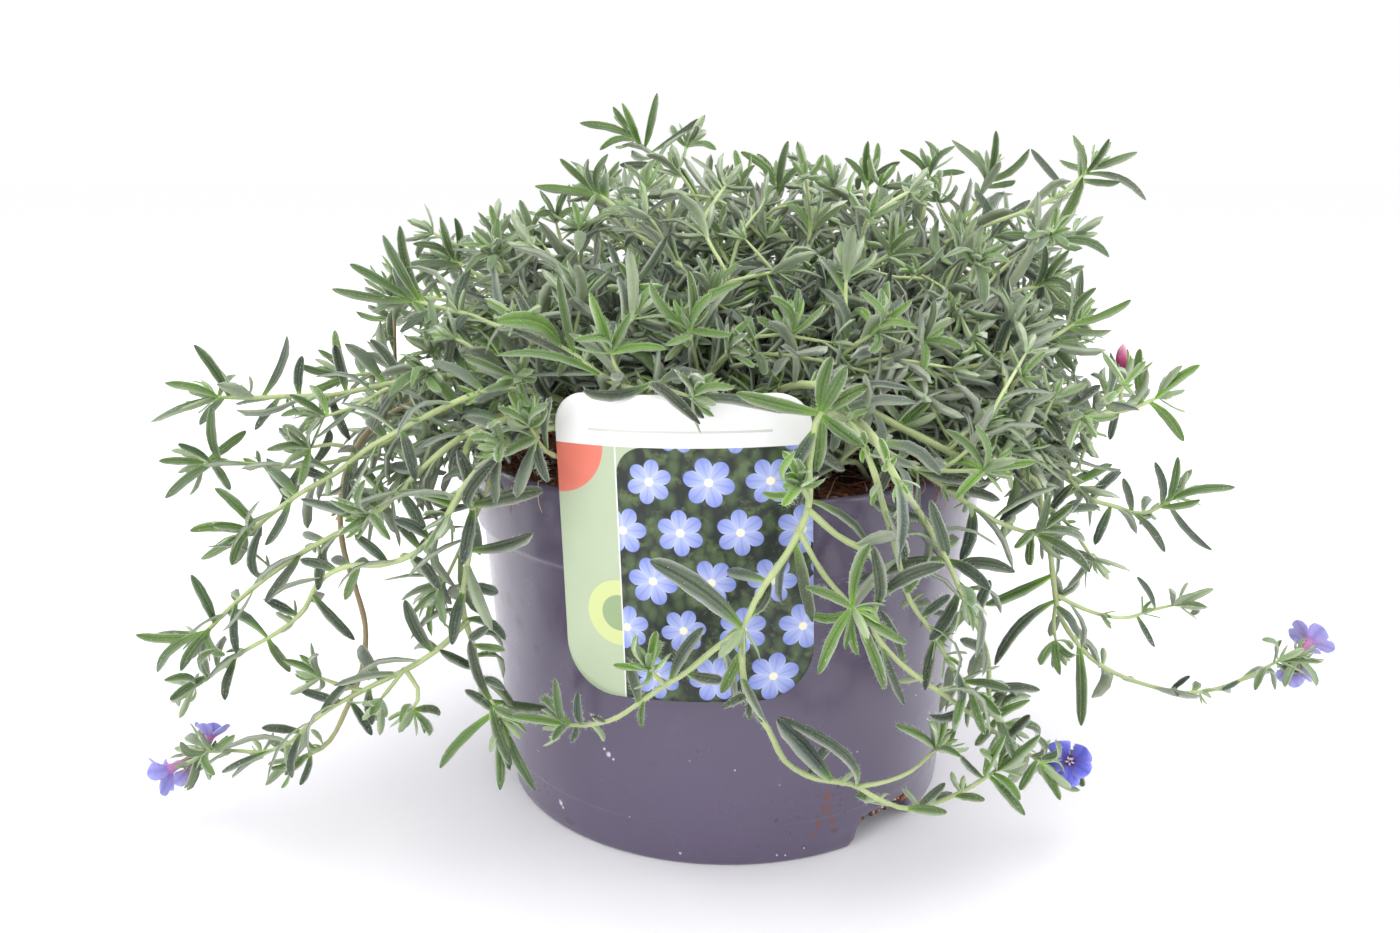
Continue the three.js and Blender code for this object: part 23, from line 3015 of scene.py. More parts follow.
31,-57,807,245,-182,1289,24,13,31,0,81,-52,27,863,289,-344,1311,30,11,51,0,63,78,2,917,267,-225,1371,24,10,71,0,80,-18,-58,973,303,-246,1292,21,12,90,0,40,-8,91]},
{"n": "shoot_back_3", "r": [75, 50], "o": 0, "k": 1, "f": 1, "p": [[-127,628,1258],[-108,681,1282],[-86,739,1341],[-12,818,1325]],
 "l": [154,-199,744,1258,27,9,0,0,67,63,39,222,13,689,1269,27,7,0,0,-17,87,46,289,-140,711,1400,31,11,0,0,56,82,-11,357,-87,854,1304,34,11,0,0,23,-13,96,425,-31,683,1386,30,11,0,0,-31,87,38,492,-205,783,1427,31,6,0,0,79,
42,45,560,16,833,1367,30,11,0,0,-49,18,85,628,-84,720,1467,27,8,0,0,45,89,6,695,-105,896,1279,34,9,0,0,85,32,43,763,43,743,1347,29,6,15,0,16,97,-16,831,-38,889,1399,24,11,40,0,76,23,-61,898,2,826,1267,30,3,64,0,52,60,61,
966,50,841,1358,25,9,88,0,5,64,-77]},
{"n": "shoot_left_top", "r": [75, 50], "o": 0, "k": 1, "f": 1, "p": [[-326,-251,1289],[-362,-277,1299],[-399,-313,1319],[-445,-362,1315]],
 "l": [160,-374,-274,1421,31,10,0,0,-78,-58,-24,240,-385,-380,1265,32,11,0,0,-82,10,56,320,-496,-210,1337,28,9,0,0,-38,-90,21,400,-318,-368,1425,29,5,0,0,-91,-41,9,480,-467,-364,1268,27,7,0,0,-19,-29,94,560,-446,-263,
1436,30,4,0,0,-51,-86,1,640,-356,-426,1325,32,3,0,0,-93,-31,21,720,-553,-300,1266,33,6,0,0,-21,-95,24,800,-462,-415,1408,27,6,29,0,-59,-42,-69,880,-469,-435,1259,26,6,57,0,-74,-9,66,960,-522,-379,1336,28,5,86,0,13,-87,
-47]},
{"n": "shoot_top_left_2", "r": [75, 50], "o": 0, "k": 1, "f": 1, "p": [[-188,-100,1265],[-214,-138,1279],[-269,-207,1308],[-317,-240,1277]],
 "l": [157,-297,-150,1410,35,11,0,0,-21,-91,-37,230,-162,-248,1286,27,12,0,0,-92,-28,29,303,-320,-122,1254,36,11,0,0,-19,-89,43,377,-220,-195,1406,27,7,0,0,-71,-66,-26,450,-278,-299,1255,34,4,0,0,-49,-6,87,523,-337,-174,
1368,31,5,0,0,-7,-100,-4,597,-220,-326,1385,35,4,0,0,-95,-30,-5,670,-366,-213,1208,35,13,0,0,-40,-81,43,743,-357,-248,1379,30,7,8,0,-49,-49,-72,817,-285,-307,1227,26,4,35,0,-98,8,-18,890,-403,-200,1235,27,5,61,0,-6,-92,
-39,963,-351,-292,1288,21,9,87,0,-43,19,-88]},
{"n": "shoot_top_right_3", "r": [75, 50], "o": 0, "k": 1, "f": 1, "p": [[508,55,1326],[528,91,1413],[562,168,1548],[513,242,1647]],
 "l": [144,592,195,1407,34,12,0,0,-15,-26,95,193,565,2,1500,29,9,0,0,2,88,48,242,427,165,1443,30,9,0,0,59,12,80,291,671,141,1462,32,4,0,0,-47,26,84,340,473,30,1559,31,6,0,0,46,73,50,389,543,234,1466,31,7,0,0,30,-25,92,
438,649,81,1569,34,4,0,0,-27,84,48,487,494,168,1574,27,6,0,0,89,30,34,536,639,233,1511,36,4,0,0,-22,4,97,584,591,83,1665,31,10,0,0,5,92,39,633,464,248,1596,35,12,0,0,63,18,76,682,685,261,1597,35,4,0,0,-51,32,80,731,520,
154,1703,26,11,4,0,-8,98,18,780,463,287,1586,27,6,21,0,13,11,99,829,581,251,1680,25,13,39,0,-91,33,23,878,440,219,1702,25,5,56,0,25,94,22,927,504,312,1651,28,5,74,0,-45,-35,82,976,514,245,1719,27,11,91,0,-61,78,-10]},
{"n": "shoot_top_right", "r": [75, 50], "o": 0, "k": 1, "f": 1, "p": [[343,185,1395],[341,183,1472],[341,192,1576],[275,189,1681]],
 "l": [149,424,93,1487,27,7,0,0,-34,28,90,208,249,187,1514,33,13,0,0,62,-7,78,267,423,248,1524,33,5,0,0,-44,-33,84,325,323,70,1599,27,9,0,0,11,74,66,384,365,307,1603,35,4,0,0,-3,-69,73,443,392,134,1593,33,13,0,0,-35,72,
60,501,222,202,1643,31,10,0,0,70,9,71,560,380,311,1605,31,12,0,0,-16,-42,89,619,438,198,1631,34,8,0,0,-61,5,79,677,279,120,1650,29,4,0,0,7,67,74,736,244,292,1698,33,11,6,0,-12,-76,64,795,346,156,1716,30,6,27,0,-92,24,32,
853,205,167,1674,24,6,48,0,29,24,93,912,267,241,1759,28,9,69,0,-70,-69,15]},
{"n": "shoot_right_bud", "r": [75, 50], "o": 0, "k": 1, "f": 1, "p": [[355,-306,1090],[387,-281,1125],[428,-214,1170],[499,-127,1188]],
 "l": [151,335,-331,1272,30,11,0,0,81,53,27,214,408,-150,1109,29,7,0,0,58,-12,81,277,483,-339,1163,30,11,0,0,20,83,51,340,323,-222,1244,30,12,0,0,83,52,20,403,463,-174,1121,29,11,0,0,0,14,99,466,469,-292,1281,35,5,0,0,
22,97,13,529,330,-119,1186,31,8,0,0,81,38,46,591,549,-178,1174,31,13,0,0,-36,75,56,654,415,-184,1301,29,10,0,0,66,74,-13,717,458,-100,1118,34,7,0,0,65,26,71,780,571,-191,1241,32,6,21,0,12,98,-14,843,466,-43,1243,27,4,44,
0,94,13,-31,906,564,-99,1142,28,12,66,0,-2,63,77,969,539,-98,1244,24,10,89,0,30,67,-68]},
{"n": "shoot_front_star_3", "r": [75, 50], "o": 0, "k": 1, "f": 1, "p": [[194,-412,1094],[252,-455,1157],[338,-486,1277],[456,-541,1297]],
 "l": [144,226,-443,1287,31,9,0,0,78,-62,-9,193,392,-428,1105,33,7,0,0,14,-58,81,242,207,-566,1205,28,5,0,0,87,8,49,291,287,-361,1271,27,9,0,0,53,-77,36,340,379,-536,1173,32,13,0,0,-3,14,99,389,171,-512,1310,33,5,0,0,84,
-8,54,438,383,-354,1259,29,9,0,0,18,-63,76,487,346,-566,1283,31,11,0,0,27,66,70,536,289,-443,1350,33,11,0,0,85,-48,20,584,481,-480,1285,32,6,0,0,-19,-30,94,633,306,-600,1371,31,6,0,0,93,13,35,682,418,-415,1357,32,11,0,0,
57,-80,20,731,421,-585,1224,28,9,4,0,71,0,70,780,413,-545,1404,30,4,21,0,88,-28,-40,829,488,-469,1260,31,6,39,0,47,-82,31,878,456,-592,1299,26,8,56,0,85,53,-4,927,489,-524,1343,25,4,74,0,50,-66,-56,976,513,-565,1274,22,
8,91,0,22,-21,95]},
{"n": "shoot_right_fan", "r": [75, 50], "o": 0, "k": 1, "f": 1, "p": [[482,-345,1287],[516,-357,1277],[564,-391,1296],[605,-424,1268]],
 "l": [164,514,-437,1160,31,6,0,0,99,9,7,252,617,-414,1379,32,10,0,0,61,-17,-77,340,638,-307,1220,36,3,0,0,51,-76,40,428,536,-479,1320,33,5,0,0,96,14,23,516,634,-336,1425,26,6,0,0,52,-85,-11,604,616,-435,1215,32,7,0,0,
58,-41,70,692,592,-492,1370,33,8,0,0,79,-24,-57,780,714,-330,1257,28,9,21,0,35,-84,-41,868,589,-483,1215,23,4,53,0,100,6,-7,956,688,-475,1287,22,13,84,0,3,-20,-98]},
{"n": "shoot_right_upper", "r": [75, 50], "o": 0, "k": 1, "f": 1, "p": [[366,-44,1281],[399,-38,1274],[443,-32,1267],[501,-8,1185]],
 "l": [160,475,-113,1236,29,8,0,0,61,79,1,240,468,15,1366,26,12,0,0,77,-5,-64,320,480,24,1137,28,7,0,0,87,-11,48,400,459,-122,1341,35,7,0,0,89,43,-16,480,487,76,1326,31,7,0,0,87,-48,-13,560,490,-89,1189,34,11,0,0,83,47,
30,640,559,-16,1307,32,8,0,0,27,15,-95,720,373,84,1157,33,7,0,0,80,2,-60,800,548,-92,1178,33,5,29,0,15,76,-64,880,544,61,1182,30,11,57,0,10,-48,-87,960,487,-15,1117,26,9,86,0,90,42,-10]},
{"n": "shoot_top_left_2", "r": [75, 50], "o": 0, "k": 1, "f": 1, "p": [[-389,-154,1504],[-428,-142,1504],[-485,-129,1512],[-533,-108,1473]],
 "l": [252,-511,-149,1401,34,5,0,0,-69,38,62,340,-452,-53,1576,27,10,0,0,-98,-11,-18,428,-568,-226,1571,32,11,0,0,-59,81,-3,516,-531,-60,1470,32,4,0,0,-71,-33,63,692,-562,-171,1435,36,11,0,0,-60,80,11,780,-541,-9,1460,
33,3,21,0,-73,-44,-52,868,-640,-132,1487,24,10,53,0,-4,50,-86,956,-538,-100,1411,27,11,84,0,-93,31,21]},
{"n": "shoot_back_10", "r": [75, 50], "o": 0, "k": 1, "f": 1, "p": [[212,376,1227],[222,435,1273],[222,489,1346],[238,622,1359]],
 "l": [149,149,468,1308,33,12,0,0,78,56,26,208,295,493,1243,28,9,0,0,-35,45,83,267,220,378,1401,28,4,0,0,11,95,31,325,165,548,1305,27,7,0,0,59,5,81,384,319,491,1388,27,9,0,0,-76,41,51,443,137,416,1421,34,5,0,0,42,76,50,
501,227,608,1344,31,10,0,0,-7,-21,98,560,303,415,1468,33,5,0,0,-29,83,47,619,115,568,1393,36,6,0,0,70,51,50,677,312,594,1358,27,7,0,0,-67,54,51,736,196,553,1480,32,8,6,0,22,94,-26,795,199,661,1293,29,9,27,0,47,47,74,853,
303,628,1397,25,4,48,0,-52,77,-36,912,199,675,1387,28,4,69,0,78,45,-44,971,262,680,1340,22,10,90,0,-50,39,77]},
{"n": "shoot_top_fan", "r": [75, 50], "o": 0, "k": 1, "f": 1, "p": [[-39,-389,1396],[-56,-431,1396],[-98,-500,1403],[-129,-559,1327]],
 "l": [157,-143,-446,1498,34,5,0,0,-4,-92,-39,230,42,-524,1400,27,8,0,0,-76,-65,-1,303,-179,-463,1346,27,4,0,0,13,-93,34,377,-81,-512,1530,27,6,0,0,-53,-70,-47,450,-57,-599,1307,27,12,0,0,-64,-45,61,523,-207,-482,1464,
28,7,0,0,5,-99,-12,597,-35,-631,1487,28,9,0,0,-82,-48,-32,670,-146,-466,1254,27,10,0,0,-34,-93,-10,743,-204,-617,1410,30,10,8,0,9,-26,-96,817,-20,-593,1280,25,8,35,0,-78,-34,-53,890,-201,-523,1296,30,10,61,0,27,-76,-59,
963,-139,-635,1311,27,7,87,0,-24,31,-92]},
{"n": "shoot_front_star_1", "r": [75, 50], "o": 0, "k": 1, "f": 1, "p": [[-109,-560,1264],[-61,-586,1298],[65,-603,1403],[248,-602,1387]],
 "l": [143,-44,-553,1412,34,11,0,0,64,-75,-13,236,-93,-693,1399,34,8,0,0,98,6,16,282,-10,-494,1351,33,4,0,0,60,-69,39,375,-56,-598,1429,33,11,0,0,99,-13,5,514,3,-533,1457,29,7,0,0,83,-48,28,653,149,-510,1432,34,8,0,0,66,
-71,22,931,275,-625,1334,25,9,75,0,68,39,62]},
{"n": "shoot_back_9", "r": [75, 50], "o": 0, "k": 1, "f": 1, "p": [[-130,331,1122],[-99,354,1181],[-49,385,1263],[39,404,1318]],
 "l": [151,-102,252,1289,35,10,0,0,47,77,43,214,-132,463,1224,34,5,0,0,67,-27,69,277,22,328,1216,35,12,0,0,-20,56,81,340,-177,341,1327,29,7,0,0,79,41,46,403,-33,463,1220,28,11,0,0,15,-29,94,466,-23,316,1301,34,3,0,0,10,
89,44,529,-129,475,1353,32,12,0,0,88,-9,47,591,52,394,1249,27,4,0,0,-6,27,96,654,-62,348,1377,36,6,0,0,84,49,23,717,12,495,1279,26,10,0,0,66,-35,67,780,88,326,1334,30,8,21,0,33,86,39,843,31,450,1410,28,3,44,0,96,-18,-21,
906,92,422,1289,28,4,66,0,20,-10,97,969,67,375,1371,25,4,89,0,72,68,-14]},
{"n": "shoot_back_4", "r": [75, 50], "o": 0, "k": 1, "f": 1, "p": [[66,506,1150],[40,541,1174],[12,585,1214],[-72,627,1213]],
 "l": [157,136,618,1240,33,6,0,0,-83,50,26,230,-44,508,1242,27,9,0,0,-11,98,15,303,20,659,1125,33,6,0,0,-47,24,85,377,80,544,1324,32,10,0,0,-58,79,19,450,-117,613,1227,29,3,0,0,40,57,72,523,79,697,1264,28,8,0,0,-85,7,52,
597,-42,533,1362,34,13,0,0,-39,91,10,670,-91,641,1146,35,6,0,0,-35,40,85,743,-3,700,1311,35,5,8,0,-95,21,-23,817,-125,566,1229,24,7,35,0,-36,91,-19,890,-95,673,1185,26,10,61,0,-77,-45,46,963,-138,655,1262,25,9,87,0,-45,
24,-86]},
{"n": "shoot_left_top", "r": [75, 50], "o": 0, "k": 1, "f": 1, "p": [[-242,-191,1208],[-266,-251,1228],[-325,-337,1267],[-349,-424,1228]],
 "l": [151,-343,-228,1293,35,12,0,0,8,-100,-5,214,-201,-345,1283,32,12,0,0,-90,-44,-4,340,-285,-261,1348,32,12,0,0,-47,-87,-14,403,-246,-407,1197,27,12,0,0,-71,-33,62,466,-445,-259,1298,35,5,0,0,-4,-95,32,529,-255,-354,
1349,29,12,0,0,-80,-59,5,654,-427,-395,1369,31,12,0,0,-1,-85,-52,717,-253,-501,1238,30,8,0,0,-89,-42,-19,780,-462,-377,1174,33,11,21,0,17,-98,-14,843,-348,-491,1275,29,4,44,0,-19,-20,-96,969,-396,-469,1223,28,3,89,0,63,
-48,-61]},
{"n": "shoot_top_left_2", "r": [75, 50], "o": 0, "k": 1, "f": 1, "p": [[-77,-349,1395],[-98,-393,1371],[-156,-455,1354],[-258,-498,1263]],
 "l": [151,-38,-510,1468,28,9,0,0,-43,-56,-71,214,-90,-398,1247,36,13,0,0,-43,-89,15,277,-195,-432,1419,35,5,0,0,1,-70,-71,340,-51,-500,1366,32,12,0,0,-88,-39,-27,403,-234,-441,1308,29,4,0,0,10,-93,35,466,-144,-477,1510,
35,7,0,0,-60,-69,-41,529,-92,-537,1243,31,3,0,0,-84,-51,21,591,-292,-398,1387,35,13,0,0,-31,-87,-38,654,-153,-596,1411,30,7,0,0,-77,-23,-60,717,-201,-433,1191,35,9,0,0,-78,-63,4,780,-302,-473,1368,27,13,21,0,-30,-33,-89,
843,-203,-564,1257,26,4,44,0,-87,23,-44,906,-300,-424,1223,26,12,66,0,-39,-85,-37,969,-333,-554,1263,28,12,89,0,-11,29,-95]},
{"n": "shoot_right_fan", "r": [75, 50], "o": 0, "k": 1, "f": 1, "p": [[384,-244,1188],[403,-241,1207],[444,-235,1263],[475,-168,1331]],
 "l": [160,401,-236,1337,28,7,0,0,98,17,-7,240,474,-156,1185,35,8,0,0,42,-24,87,320,451,-339,1287,35,10,0,0,52,68,52,400,403,-152,1307,26,13,0,0,74,-45,50,480,527,-272,1239,30,13,0,0,-5,17,98,560,407,-290,1349,35,12,0,0,
85,39,37,640,437,-109,1312,30,10,0,0,65,-28,71,720,576,-224,1288,33,3,0,0,-10,66,74,800,431,-189,1418,31,5,29,0,60,80,-3,880,476,-92,1311,22,6,57,0,28,-8,96,960,526,-144,1405,21,5,86,0,-39,92,-9]},
{"n": "shoot_back_11", "r": [75, 50], "o": 0, "k": 1, "f": 1, "p": [[-536,-47,1417],[-611,-30,1415],[-701,40,1438],[-836,87,1303]],
 "l": [146,-653,-115,1373,35,4,0,0,-69,69,21,198,-636,70,1407,26,9,0,0,-89,-46,-2,249,-662,-71,1492,28,11,0,0,-74,49,-46,301,-709,0,1325,35,13,0,0,-54,34,77,353,-594,75,1533,33,5,0,0,-96,28,-7,405,-760,-74,1467,28,8,0,0,
-30,92,25,456,-639,156,1371,29,5,0,0,-76,22,60,508,-677,16,1552,34,13,0,0,-70,69,-20,560,-816,16,1361,29,5,0,0,-31,77,56,612,-668,151,1473,27,9,0,0,-97,17,-17,715,-681,67,1308,27,8,0,0,-92,30,-25,767,-848,152,1439,30,6,
17,0,-36,-11,-93,819,-818,5,1325,25,8,35,0,-38,83,-42,871,-810,144,1286,26,4,54,0,-76,-58,-28,922,-913,84,1322,27,5,72,0,15,24,-96,974,-840,70,1238,23,4,91,0,-82,56,6]},
{"n": "shoot_top_centre", "r": [75, 50], "o": 0, "k": 1, "f": 1, "p": [[60,-143,1304],[59,-109,1347],[64,-39,1398],[45,58,1431]],
 "l": [154,91,-166,1448,30,3,0,0,-20,93,32,222,-12,-38,1389,29,8,0,0,72,14,68,289,166,-68,1371,28,13,0,0,-45,58,68,357,14,-103,1452,30,12,0,0,38,91,15,425,64,32,1365,32,5,0,0,12,-3,99,492,128,-64,1467,32,8,0,0,-37,93,10,
560,-87,-10,1444,29,3,0,0,46,76,46,628,157,78,1372,35,9,0,0,-48,47,74,695,55,12,1532,35,12,0,0,-10,94,-32,763,-36,90,1375,31,11,15,0,41,60,69,831,110,113,1467,29,5,40,0,-88,47,-5,898,-20,66,1495,24,12,64,0,28,94,-21,966,
40,121,1414,28,11,88,0,-26,16,95]},
{"n": "shoot_left_top", "r": [75, 50], "o": 0, "k": 1, "f": 1, "p": [[-259,-264,1287],[-242,-299,1318],[-223,-341,1374],[-154,-399,1377]],
 "l": [157,-190,-373,1257,33,7,0,0,10,-37,92,230,-300,-344,1421,30,8,0,0,80,-59,8,303,-93,-296,1401,27,11,0,0,-28,-83,48,377,-283,-417,1335,33,10,0,0,45,-8,89,450,-245,-259,1486,35,5,0,0,21,-92,34,523,-124,-413,1395,35,
9,0,0,-45,-14,88,597,-276,-410,1443,35,5,0,0,92,-17,36,670,-103,-331,1493,33,10,0,0,21,-97,-13,743,-154,-440,1292,33,11,8,0,61,-31,72,817,-173,-436,1461,32,8,35,0,79,-34,-51,890,-91,-388,1369,24,8,61,0,-10,-99,5,963,
-143,-469,1363,23,11,87,0,96,20,17]},
{"n": "shoot_right_upper", "r": [75, 50], "o": 0, "k": 1, "f": 1, "p": [[415,-47,1366],[467,-86,1389],[534,-120,1429],[613,-242,1387]],
 "l": [149,541,-47,1468,35,6,0,0,34,-92,-21,208,515,-165,1287,31,4,0,0,61,-29,74,267,476,-144,1502,34,13,0,0,91,-27,-31,325,612,-41,1411,33,9,0,0,20,-89,42,384,507,-210,1405,31,11,0,0,74,24,62,443,476,-41,1538,34,12,0,0,
86,-44,25,501,639,-107,1384,36,12,0,0,18,-32,93,619,665,-74,1494,26,5,0,0,28,-96,-7,677,559,-225,1363,30,6,0,0,81,-18,56,795,663,-170,1350,28,8,27,0,-2,-99,10,853,539,-309,1388,24,11,48,0,93,-23,-30,912,685,-259,1441,28,
4,69,0,-5,-68,-73,971,638,-284,1317,23,10,90,0,42,-64,64]},
{"n": "shoot_top_right_3", "r": [75, 50], "o": 0, "k": 1, "f": 1, "p": [[384,71,1159],[407,12,1191],[434,-77,1256],[446,-217,1213]],
 "l": [147,458,44,1271,29,11,0,0,6,-100,-7,203,446,-68,1093,34,9,0,0,20,-55,81,258,329,-31,1319,27,6,0,0,66,-75,3,312,510,-1,1226,30,8,0,0,-29,-88,39,367,376,-99,1210,34,11,0,0,64,-12,76,422,419,16,1318,34,5,0,0,26,-94,
20,477,535,-116,1201,29,13,0,0,-19,-43,88,532,343,-88,1297,34,8,0,0,69,-59,41,588,541,-91,1365,29,11,0,0,-33,-95,0,642,411,-197,1161,31,8,0,0,33,-59,74,698,401,-176,1372,29,8,0,0,31,-80,-51,752,540,-143,1212,26,12,12,0,
-34,-93,-11,807,366,-189,1211,30,11,31,0,64,-75,-16,863,472,-234,1264,31,12,51,0,-26,-43,-87,917,465,-244,1145,28,13,71,0,-20,-80,56,973,408,-288,1230,25,8,90,0,61,-39,-69]},
{"n": "shoot_top_left_2", "r": [75, 50], "o": 0, "k": 1, "f": 1, "p": [[-248,-221,1440],[-216,-266,1460],[-142,-338,1499],[9,-445,1442]],
 "l": [146,-114,-289,1416,34,12,0,0,-13,-75,65,198,-289,-393,1511,33,9,0,0,94,-31,14,249,-131,-214,1565,29,6,0,0,33,-94,4,301,-134,-390,1405,33,11,0,0,32,-16,93,353,-225,-340,1594,35,11,0,0,86,-48,-18,405,-51,-250,1497,
26,12,0,0,7,-87,49,456,-192,-449,1499,34,9,0,0,81,9,59,508,-151,-298,1590,31,4,0,0,56,-81,-17,560,-37,-369,1438,27,7,0,0,10,-54,83,612,-172,-433,1565,27,13,0,0,97,-20,-14,664,5,-324,1548,29,10,0,0,19,-93,-33,715,-92,
-465,1370,35,5,0,0,89,-20,41,767,-49,-436,1585,32,6,17,0,67,-38,-64,819,13,-371,1424,31,8,35,0,19,-98,9,871,-42,-487,1448,25,7,54,0,95,19,-26,922,75,-434,1498,24,7,72,0,22,-60,-77,974,41,-465,1394,22,8,91,0,54,-46,70]},
{"n": "shoot_top_mid", "r": [75, 50], "o": 0, "k": 1, "f": 1, "p": [[106,131,1298],[67,116,1334],[16,106,1400],[-119,96,1392]],
 "l": [151,-56,145,1270,27,5,0,0,-31,-44,84,214,83,140,1444,34,10,0,0,-88,-47,8,277,12,2,1342,31,12,0,0,-50,38,78,340,-22,245,1392,32,12,0,0,-42,-59,69,403,113,57,1451,33,12,0,0,-84,15,52,466,-81,80,1401,35,10,0,0,27,7,
96,529,65,194,1498,26,5,0,0,-73,-50,47,591,-18,-12,1457,30,3,0,0,-65,56,51,654,-57,189,1363,31,6,0,0,-72,-44,53,717,-66,78,1548,31,6,0,0,-91,-1,-41,780,-103,56,1349,32,4,21,0,-67,46,59,843,-129,187,1430,25,12,44,0,-75,
-58,-31,906,-165,38,1427,28,5,66,0,-60,58,-55,969,-194,110,1343,25,7,89,0,-50,-41,76]},
{"n": "shoot_top_mid", "r": [75, 50], "o": 0, "k": 1, "f": 1, "p": [[49,210,1068],[114,208,1096],[164,233,1159],[356,223,1087]],
 "l": [147,156,264,1201,27,6,0,0,83,-46,-32,258,156,129,1218,35,5,0,0,88,46,-11,312,147,320,1138,27,8,0,0,79,-43,43,367,230,192,1145,28,3,0,0,-23,52,82,422,85,189,1230,30,6,0,0,71,60,37,477,149,339,1156,35,9,0,0,24,-26,
93,532,210,146,1210,29,3,0,0,13,72,68,588,155,339,1280,28,12,0,0,97,-23,10,642,242,205,1057,33,9,0,0,77,26,58,698,249,197,1238,35,7,0,0,77,21,-60,752,261,319,1109,34,9,12,0,79,-60,-13,807,304,135,1086,33,5,31,0,77,62,
-14,863,360,253,1163,28,8,51,0,45,-28,-85,973,420,177,1100,22,11,90,0,39,59,-71]},
]
FLOWERS = {
 "flower_left_1": {
  "throat": [
   -151.4,
   -56,
   22.2
  ],
  "aim": [
   -0.86,
   -0.28,
   -0.43
  ],
  "size": 6.5,
  "tube": 7,
  "turn": 0.2,
  "deep": 0.45,
  "lift": 0.5
 },
 "flower_left_2": {
  "throat": [
   -151,
   -46,
   16.9
  ],
  "aim": [
   -0.7,
   0.15,
   -0.7
  ],
  "size": 5,
  "tube": 4.5,
  "turn": 0.5,
  "deep": 0.1,
  "lift": 0.5
 },
 "flower_left_3": {
  "throat": [
   -146.7,
   -39,
   23.9
  ],
  "aim": [
   0.1,
   0.5,
   0.85
  ],
  "size": 5.6,
  "tube": 4.5,
  "turn": 0.9,
  "deep": 0.3,
  "lift": 0.6
 },
 "flower_right_1": {
  "throat": [
   172.5,
   -21,
   44.6
  ],
  "aim": [
   0.7,
   0.6,
   0.4
  ],
  "size": 6.8,
  "tube": 6,
  "turn": 0.3,
  "deep": 0.1,
  "lift": 0.3
 },
 "flower_right_2": {
  "throat": [
   168,
   -23.5,
   36.7
  ],
  "aim": [
   0.15,
   0.35,
   -0.9
  ],
  "size": 5.5,
  "tube": 3.6,
  "turn": 0.1,
  "deep": 0.1,
  "lift": 0.4
 },
 "flower_front": {
  "throat": [
   90,
   -62,
   28.2
  ],
  "aim": [
   -0.35,
   -0.82,
   0.36
  ],
  "size": 6.9,
  "tube": 6,
  "turn": 0.3,
  "deep": 0.85,
  "lift": 0.5
 }
}
BUD = {"foot": [105.9, -31, 127], "aim": [-0.05, 0, 1], "length": 7.4, "r": 1.5}


# ---------------------------------------------------------------- crown
def build_crown():
    b = Bag()
    r = np.random.default_rng(30)
    for i in range(9):
        a = i * .7 + r.uniform(-.2, .2)
        e = r.uniform(.0, 5.5)
        p = [np.array([e * math.cos(a) * 1.1, e * math.sin(a) * 1.1, 97.0]), np.array([e * .9 * math.cos(a), e * .9 * math.sin(a), 101.5]),
             np.array([e * .8 * math.cos(a + .2), e * .8 * math.sin(a + .2), 105.0]), np.array([e * .5 * math.cos(a + .3), e * .5 * math.sin(a + .3), 107.6 + r.uniform(-.6, .3)])]
        c, s = even(cr(p, 4), 1.0)
        rad = np.interp(s, [0, .4, 1], [2.9, 2.3, 1.4]) * (1 + .1 * np.sin(s * 20 + i))
        tube(b, c, rad, 10, np.outer(np.interp(s, [0, 1], [.8, 1.1]), BARK))
    return b


bark_mat = vertex_material("crown_bark", .85, 700.0, .6, 1.25, bump=.7, dist=.0005, spec=.3)
crown = build_crown().make("crown_wood", bark_mat)
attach(crown, "root")
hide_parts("crown")


# ---------------------------------------------------------------- petals
PETAL_W = np.array([.30, .36, .50, .70, .86, .97, 1.0, .94, .74, .46, .20])


def petal_colours(inner, outer, vein, pale):
    inner, outer, vein, pale = (np.array(c) for c in (inner, outer, vein, pale))

    def f(lod, t, n, r):
        g = np.interp(t, [0, .25, 1], [0, .55, 1])[None, :, None, None]
        c = inner * (1 - g) + outer * g
        c = np.broadcast_to(c, (n, len(t), lod.C, 3)).copy()
        mid = np.clip(1 - np.abs(lod.u) / .3, 0, 1)[None, None, :, None] * .55
        c = c * (1 - mid) + vein * mid
        e = np.clip((np.abs(lod.u) - .6) / .4, 0, 1)[None, None, :, None] * .45
        c = c * (1 - e) + pale * e
        c = c * r.uniform(.93, 1.07, (n, 1, 1, 1))
        cu = inner * (1 - g) + (outer * .6 + pale * .4) * g
        cu = np.broadcast_to(cu, (n, len(t), lod.U, 3)).copy()
        mu = np.clip(1 - np.abs(lod.uu) / .5, 0, 1)[None, None, :, None] * .4
        cu = cu * (1 - mu) + vein * mu
        return c, cu
    return f


# ---------------------------------------------------------------- shoots
def leaf_material(name):
    n = Nodes(name)
    o = n.coord()
    c = n.attr("Col", "Color")
    big = n.noise(o, 90.0, 3.0, .6)
    fine = n.noise(o, 1500.0, 3.0, .6)
    dots = n.voronoi(o, 1700.0)
    col = n.mix(n.step(big, .3, .7), n.vmath("MULTIPLY", c, (.86, .88, .84)), n.vmath("MULTIPLY", c, (1.12, 1.1, 1.08)))
    col = n.mix(M_(n, n.step(dots, .34, .2), .13), col, HAIR_T)
    col = n.mix(M_(n, n.step(fine, .56, .75), .22), col, n.vmath("MULTIPLY", c, (.62, .66, .6)))
    h = n.math("ADD", n.step(dots, .5, .1), n.math("MULTIPLY", fine, .8))
    n.bump(h, .45, .00016)
    rough = n.remap(fine, .3, .7, .5, .66)
    m = n.finish(col, rough, **{"Specular IOR Level": .45})
    n.p.inputs["Sheen Weight"].default_value = .34
    n.p.inputs["Sheen Roughness"].default_value = .4
    n.p.inputs["Sheen Tint"].default_value = (1, 1, 1, 1)
    return m


def M_(n, a, b):
    return n.math("MULTIPLY", a, b)


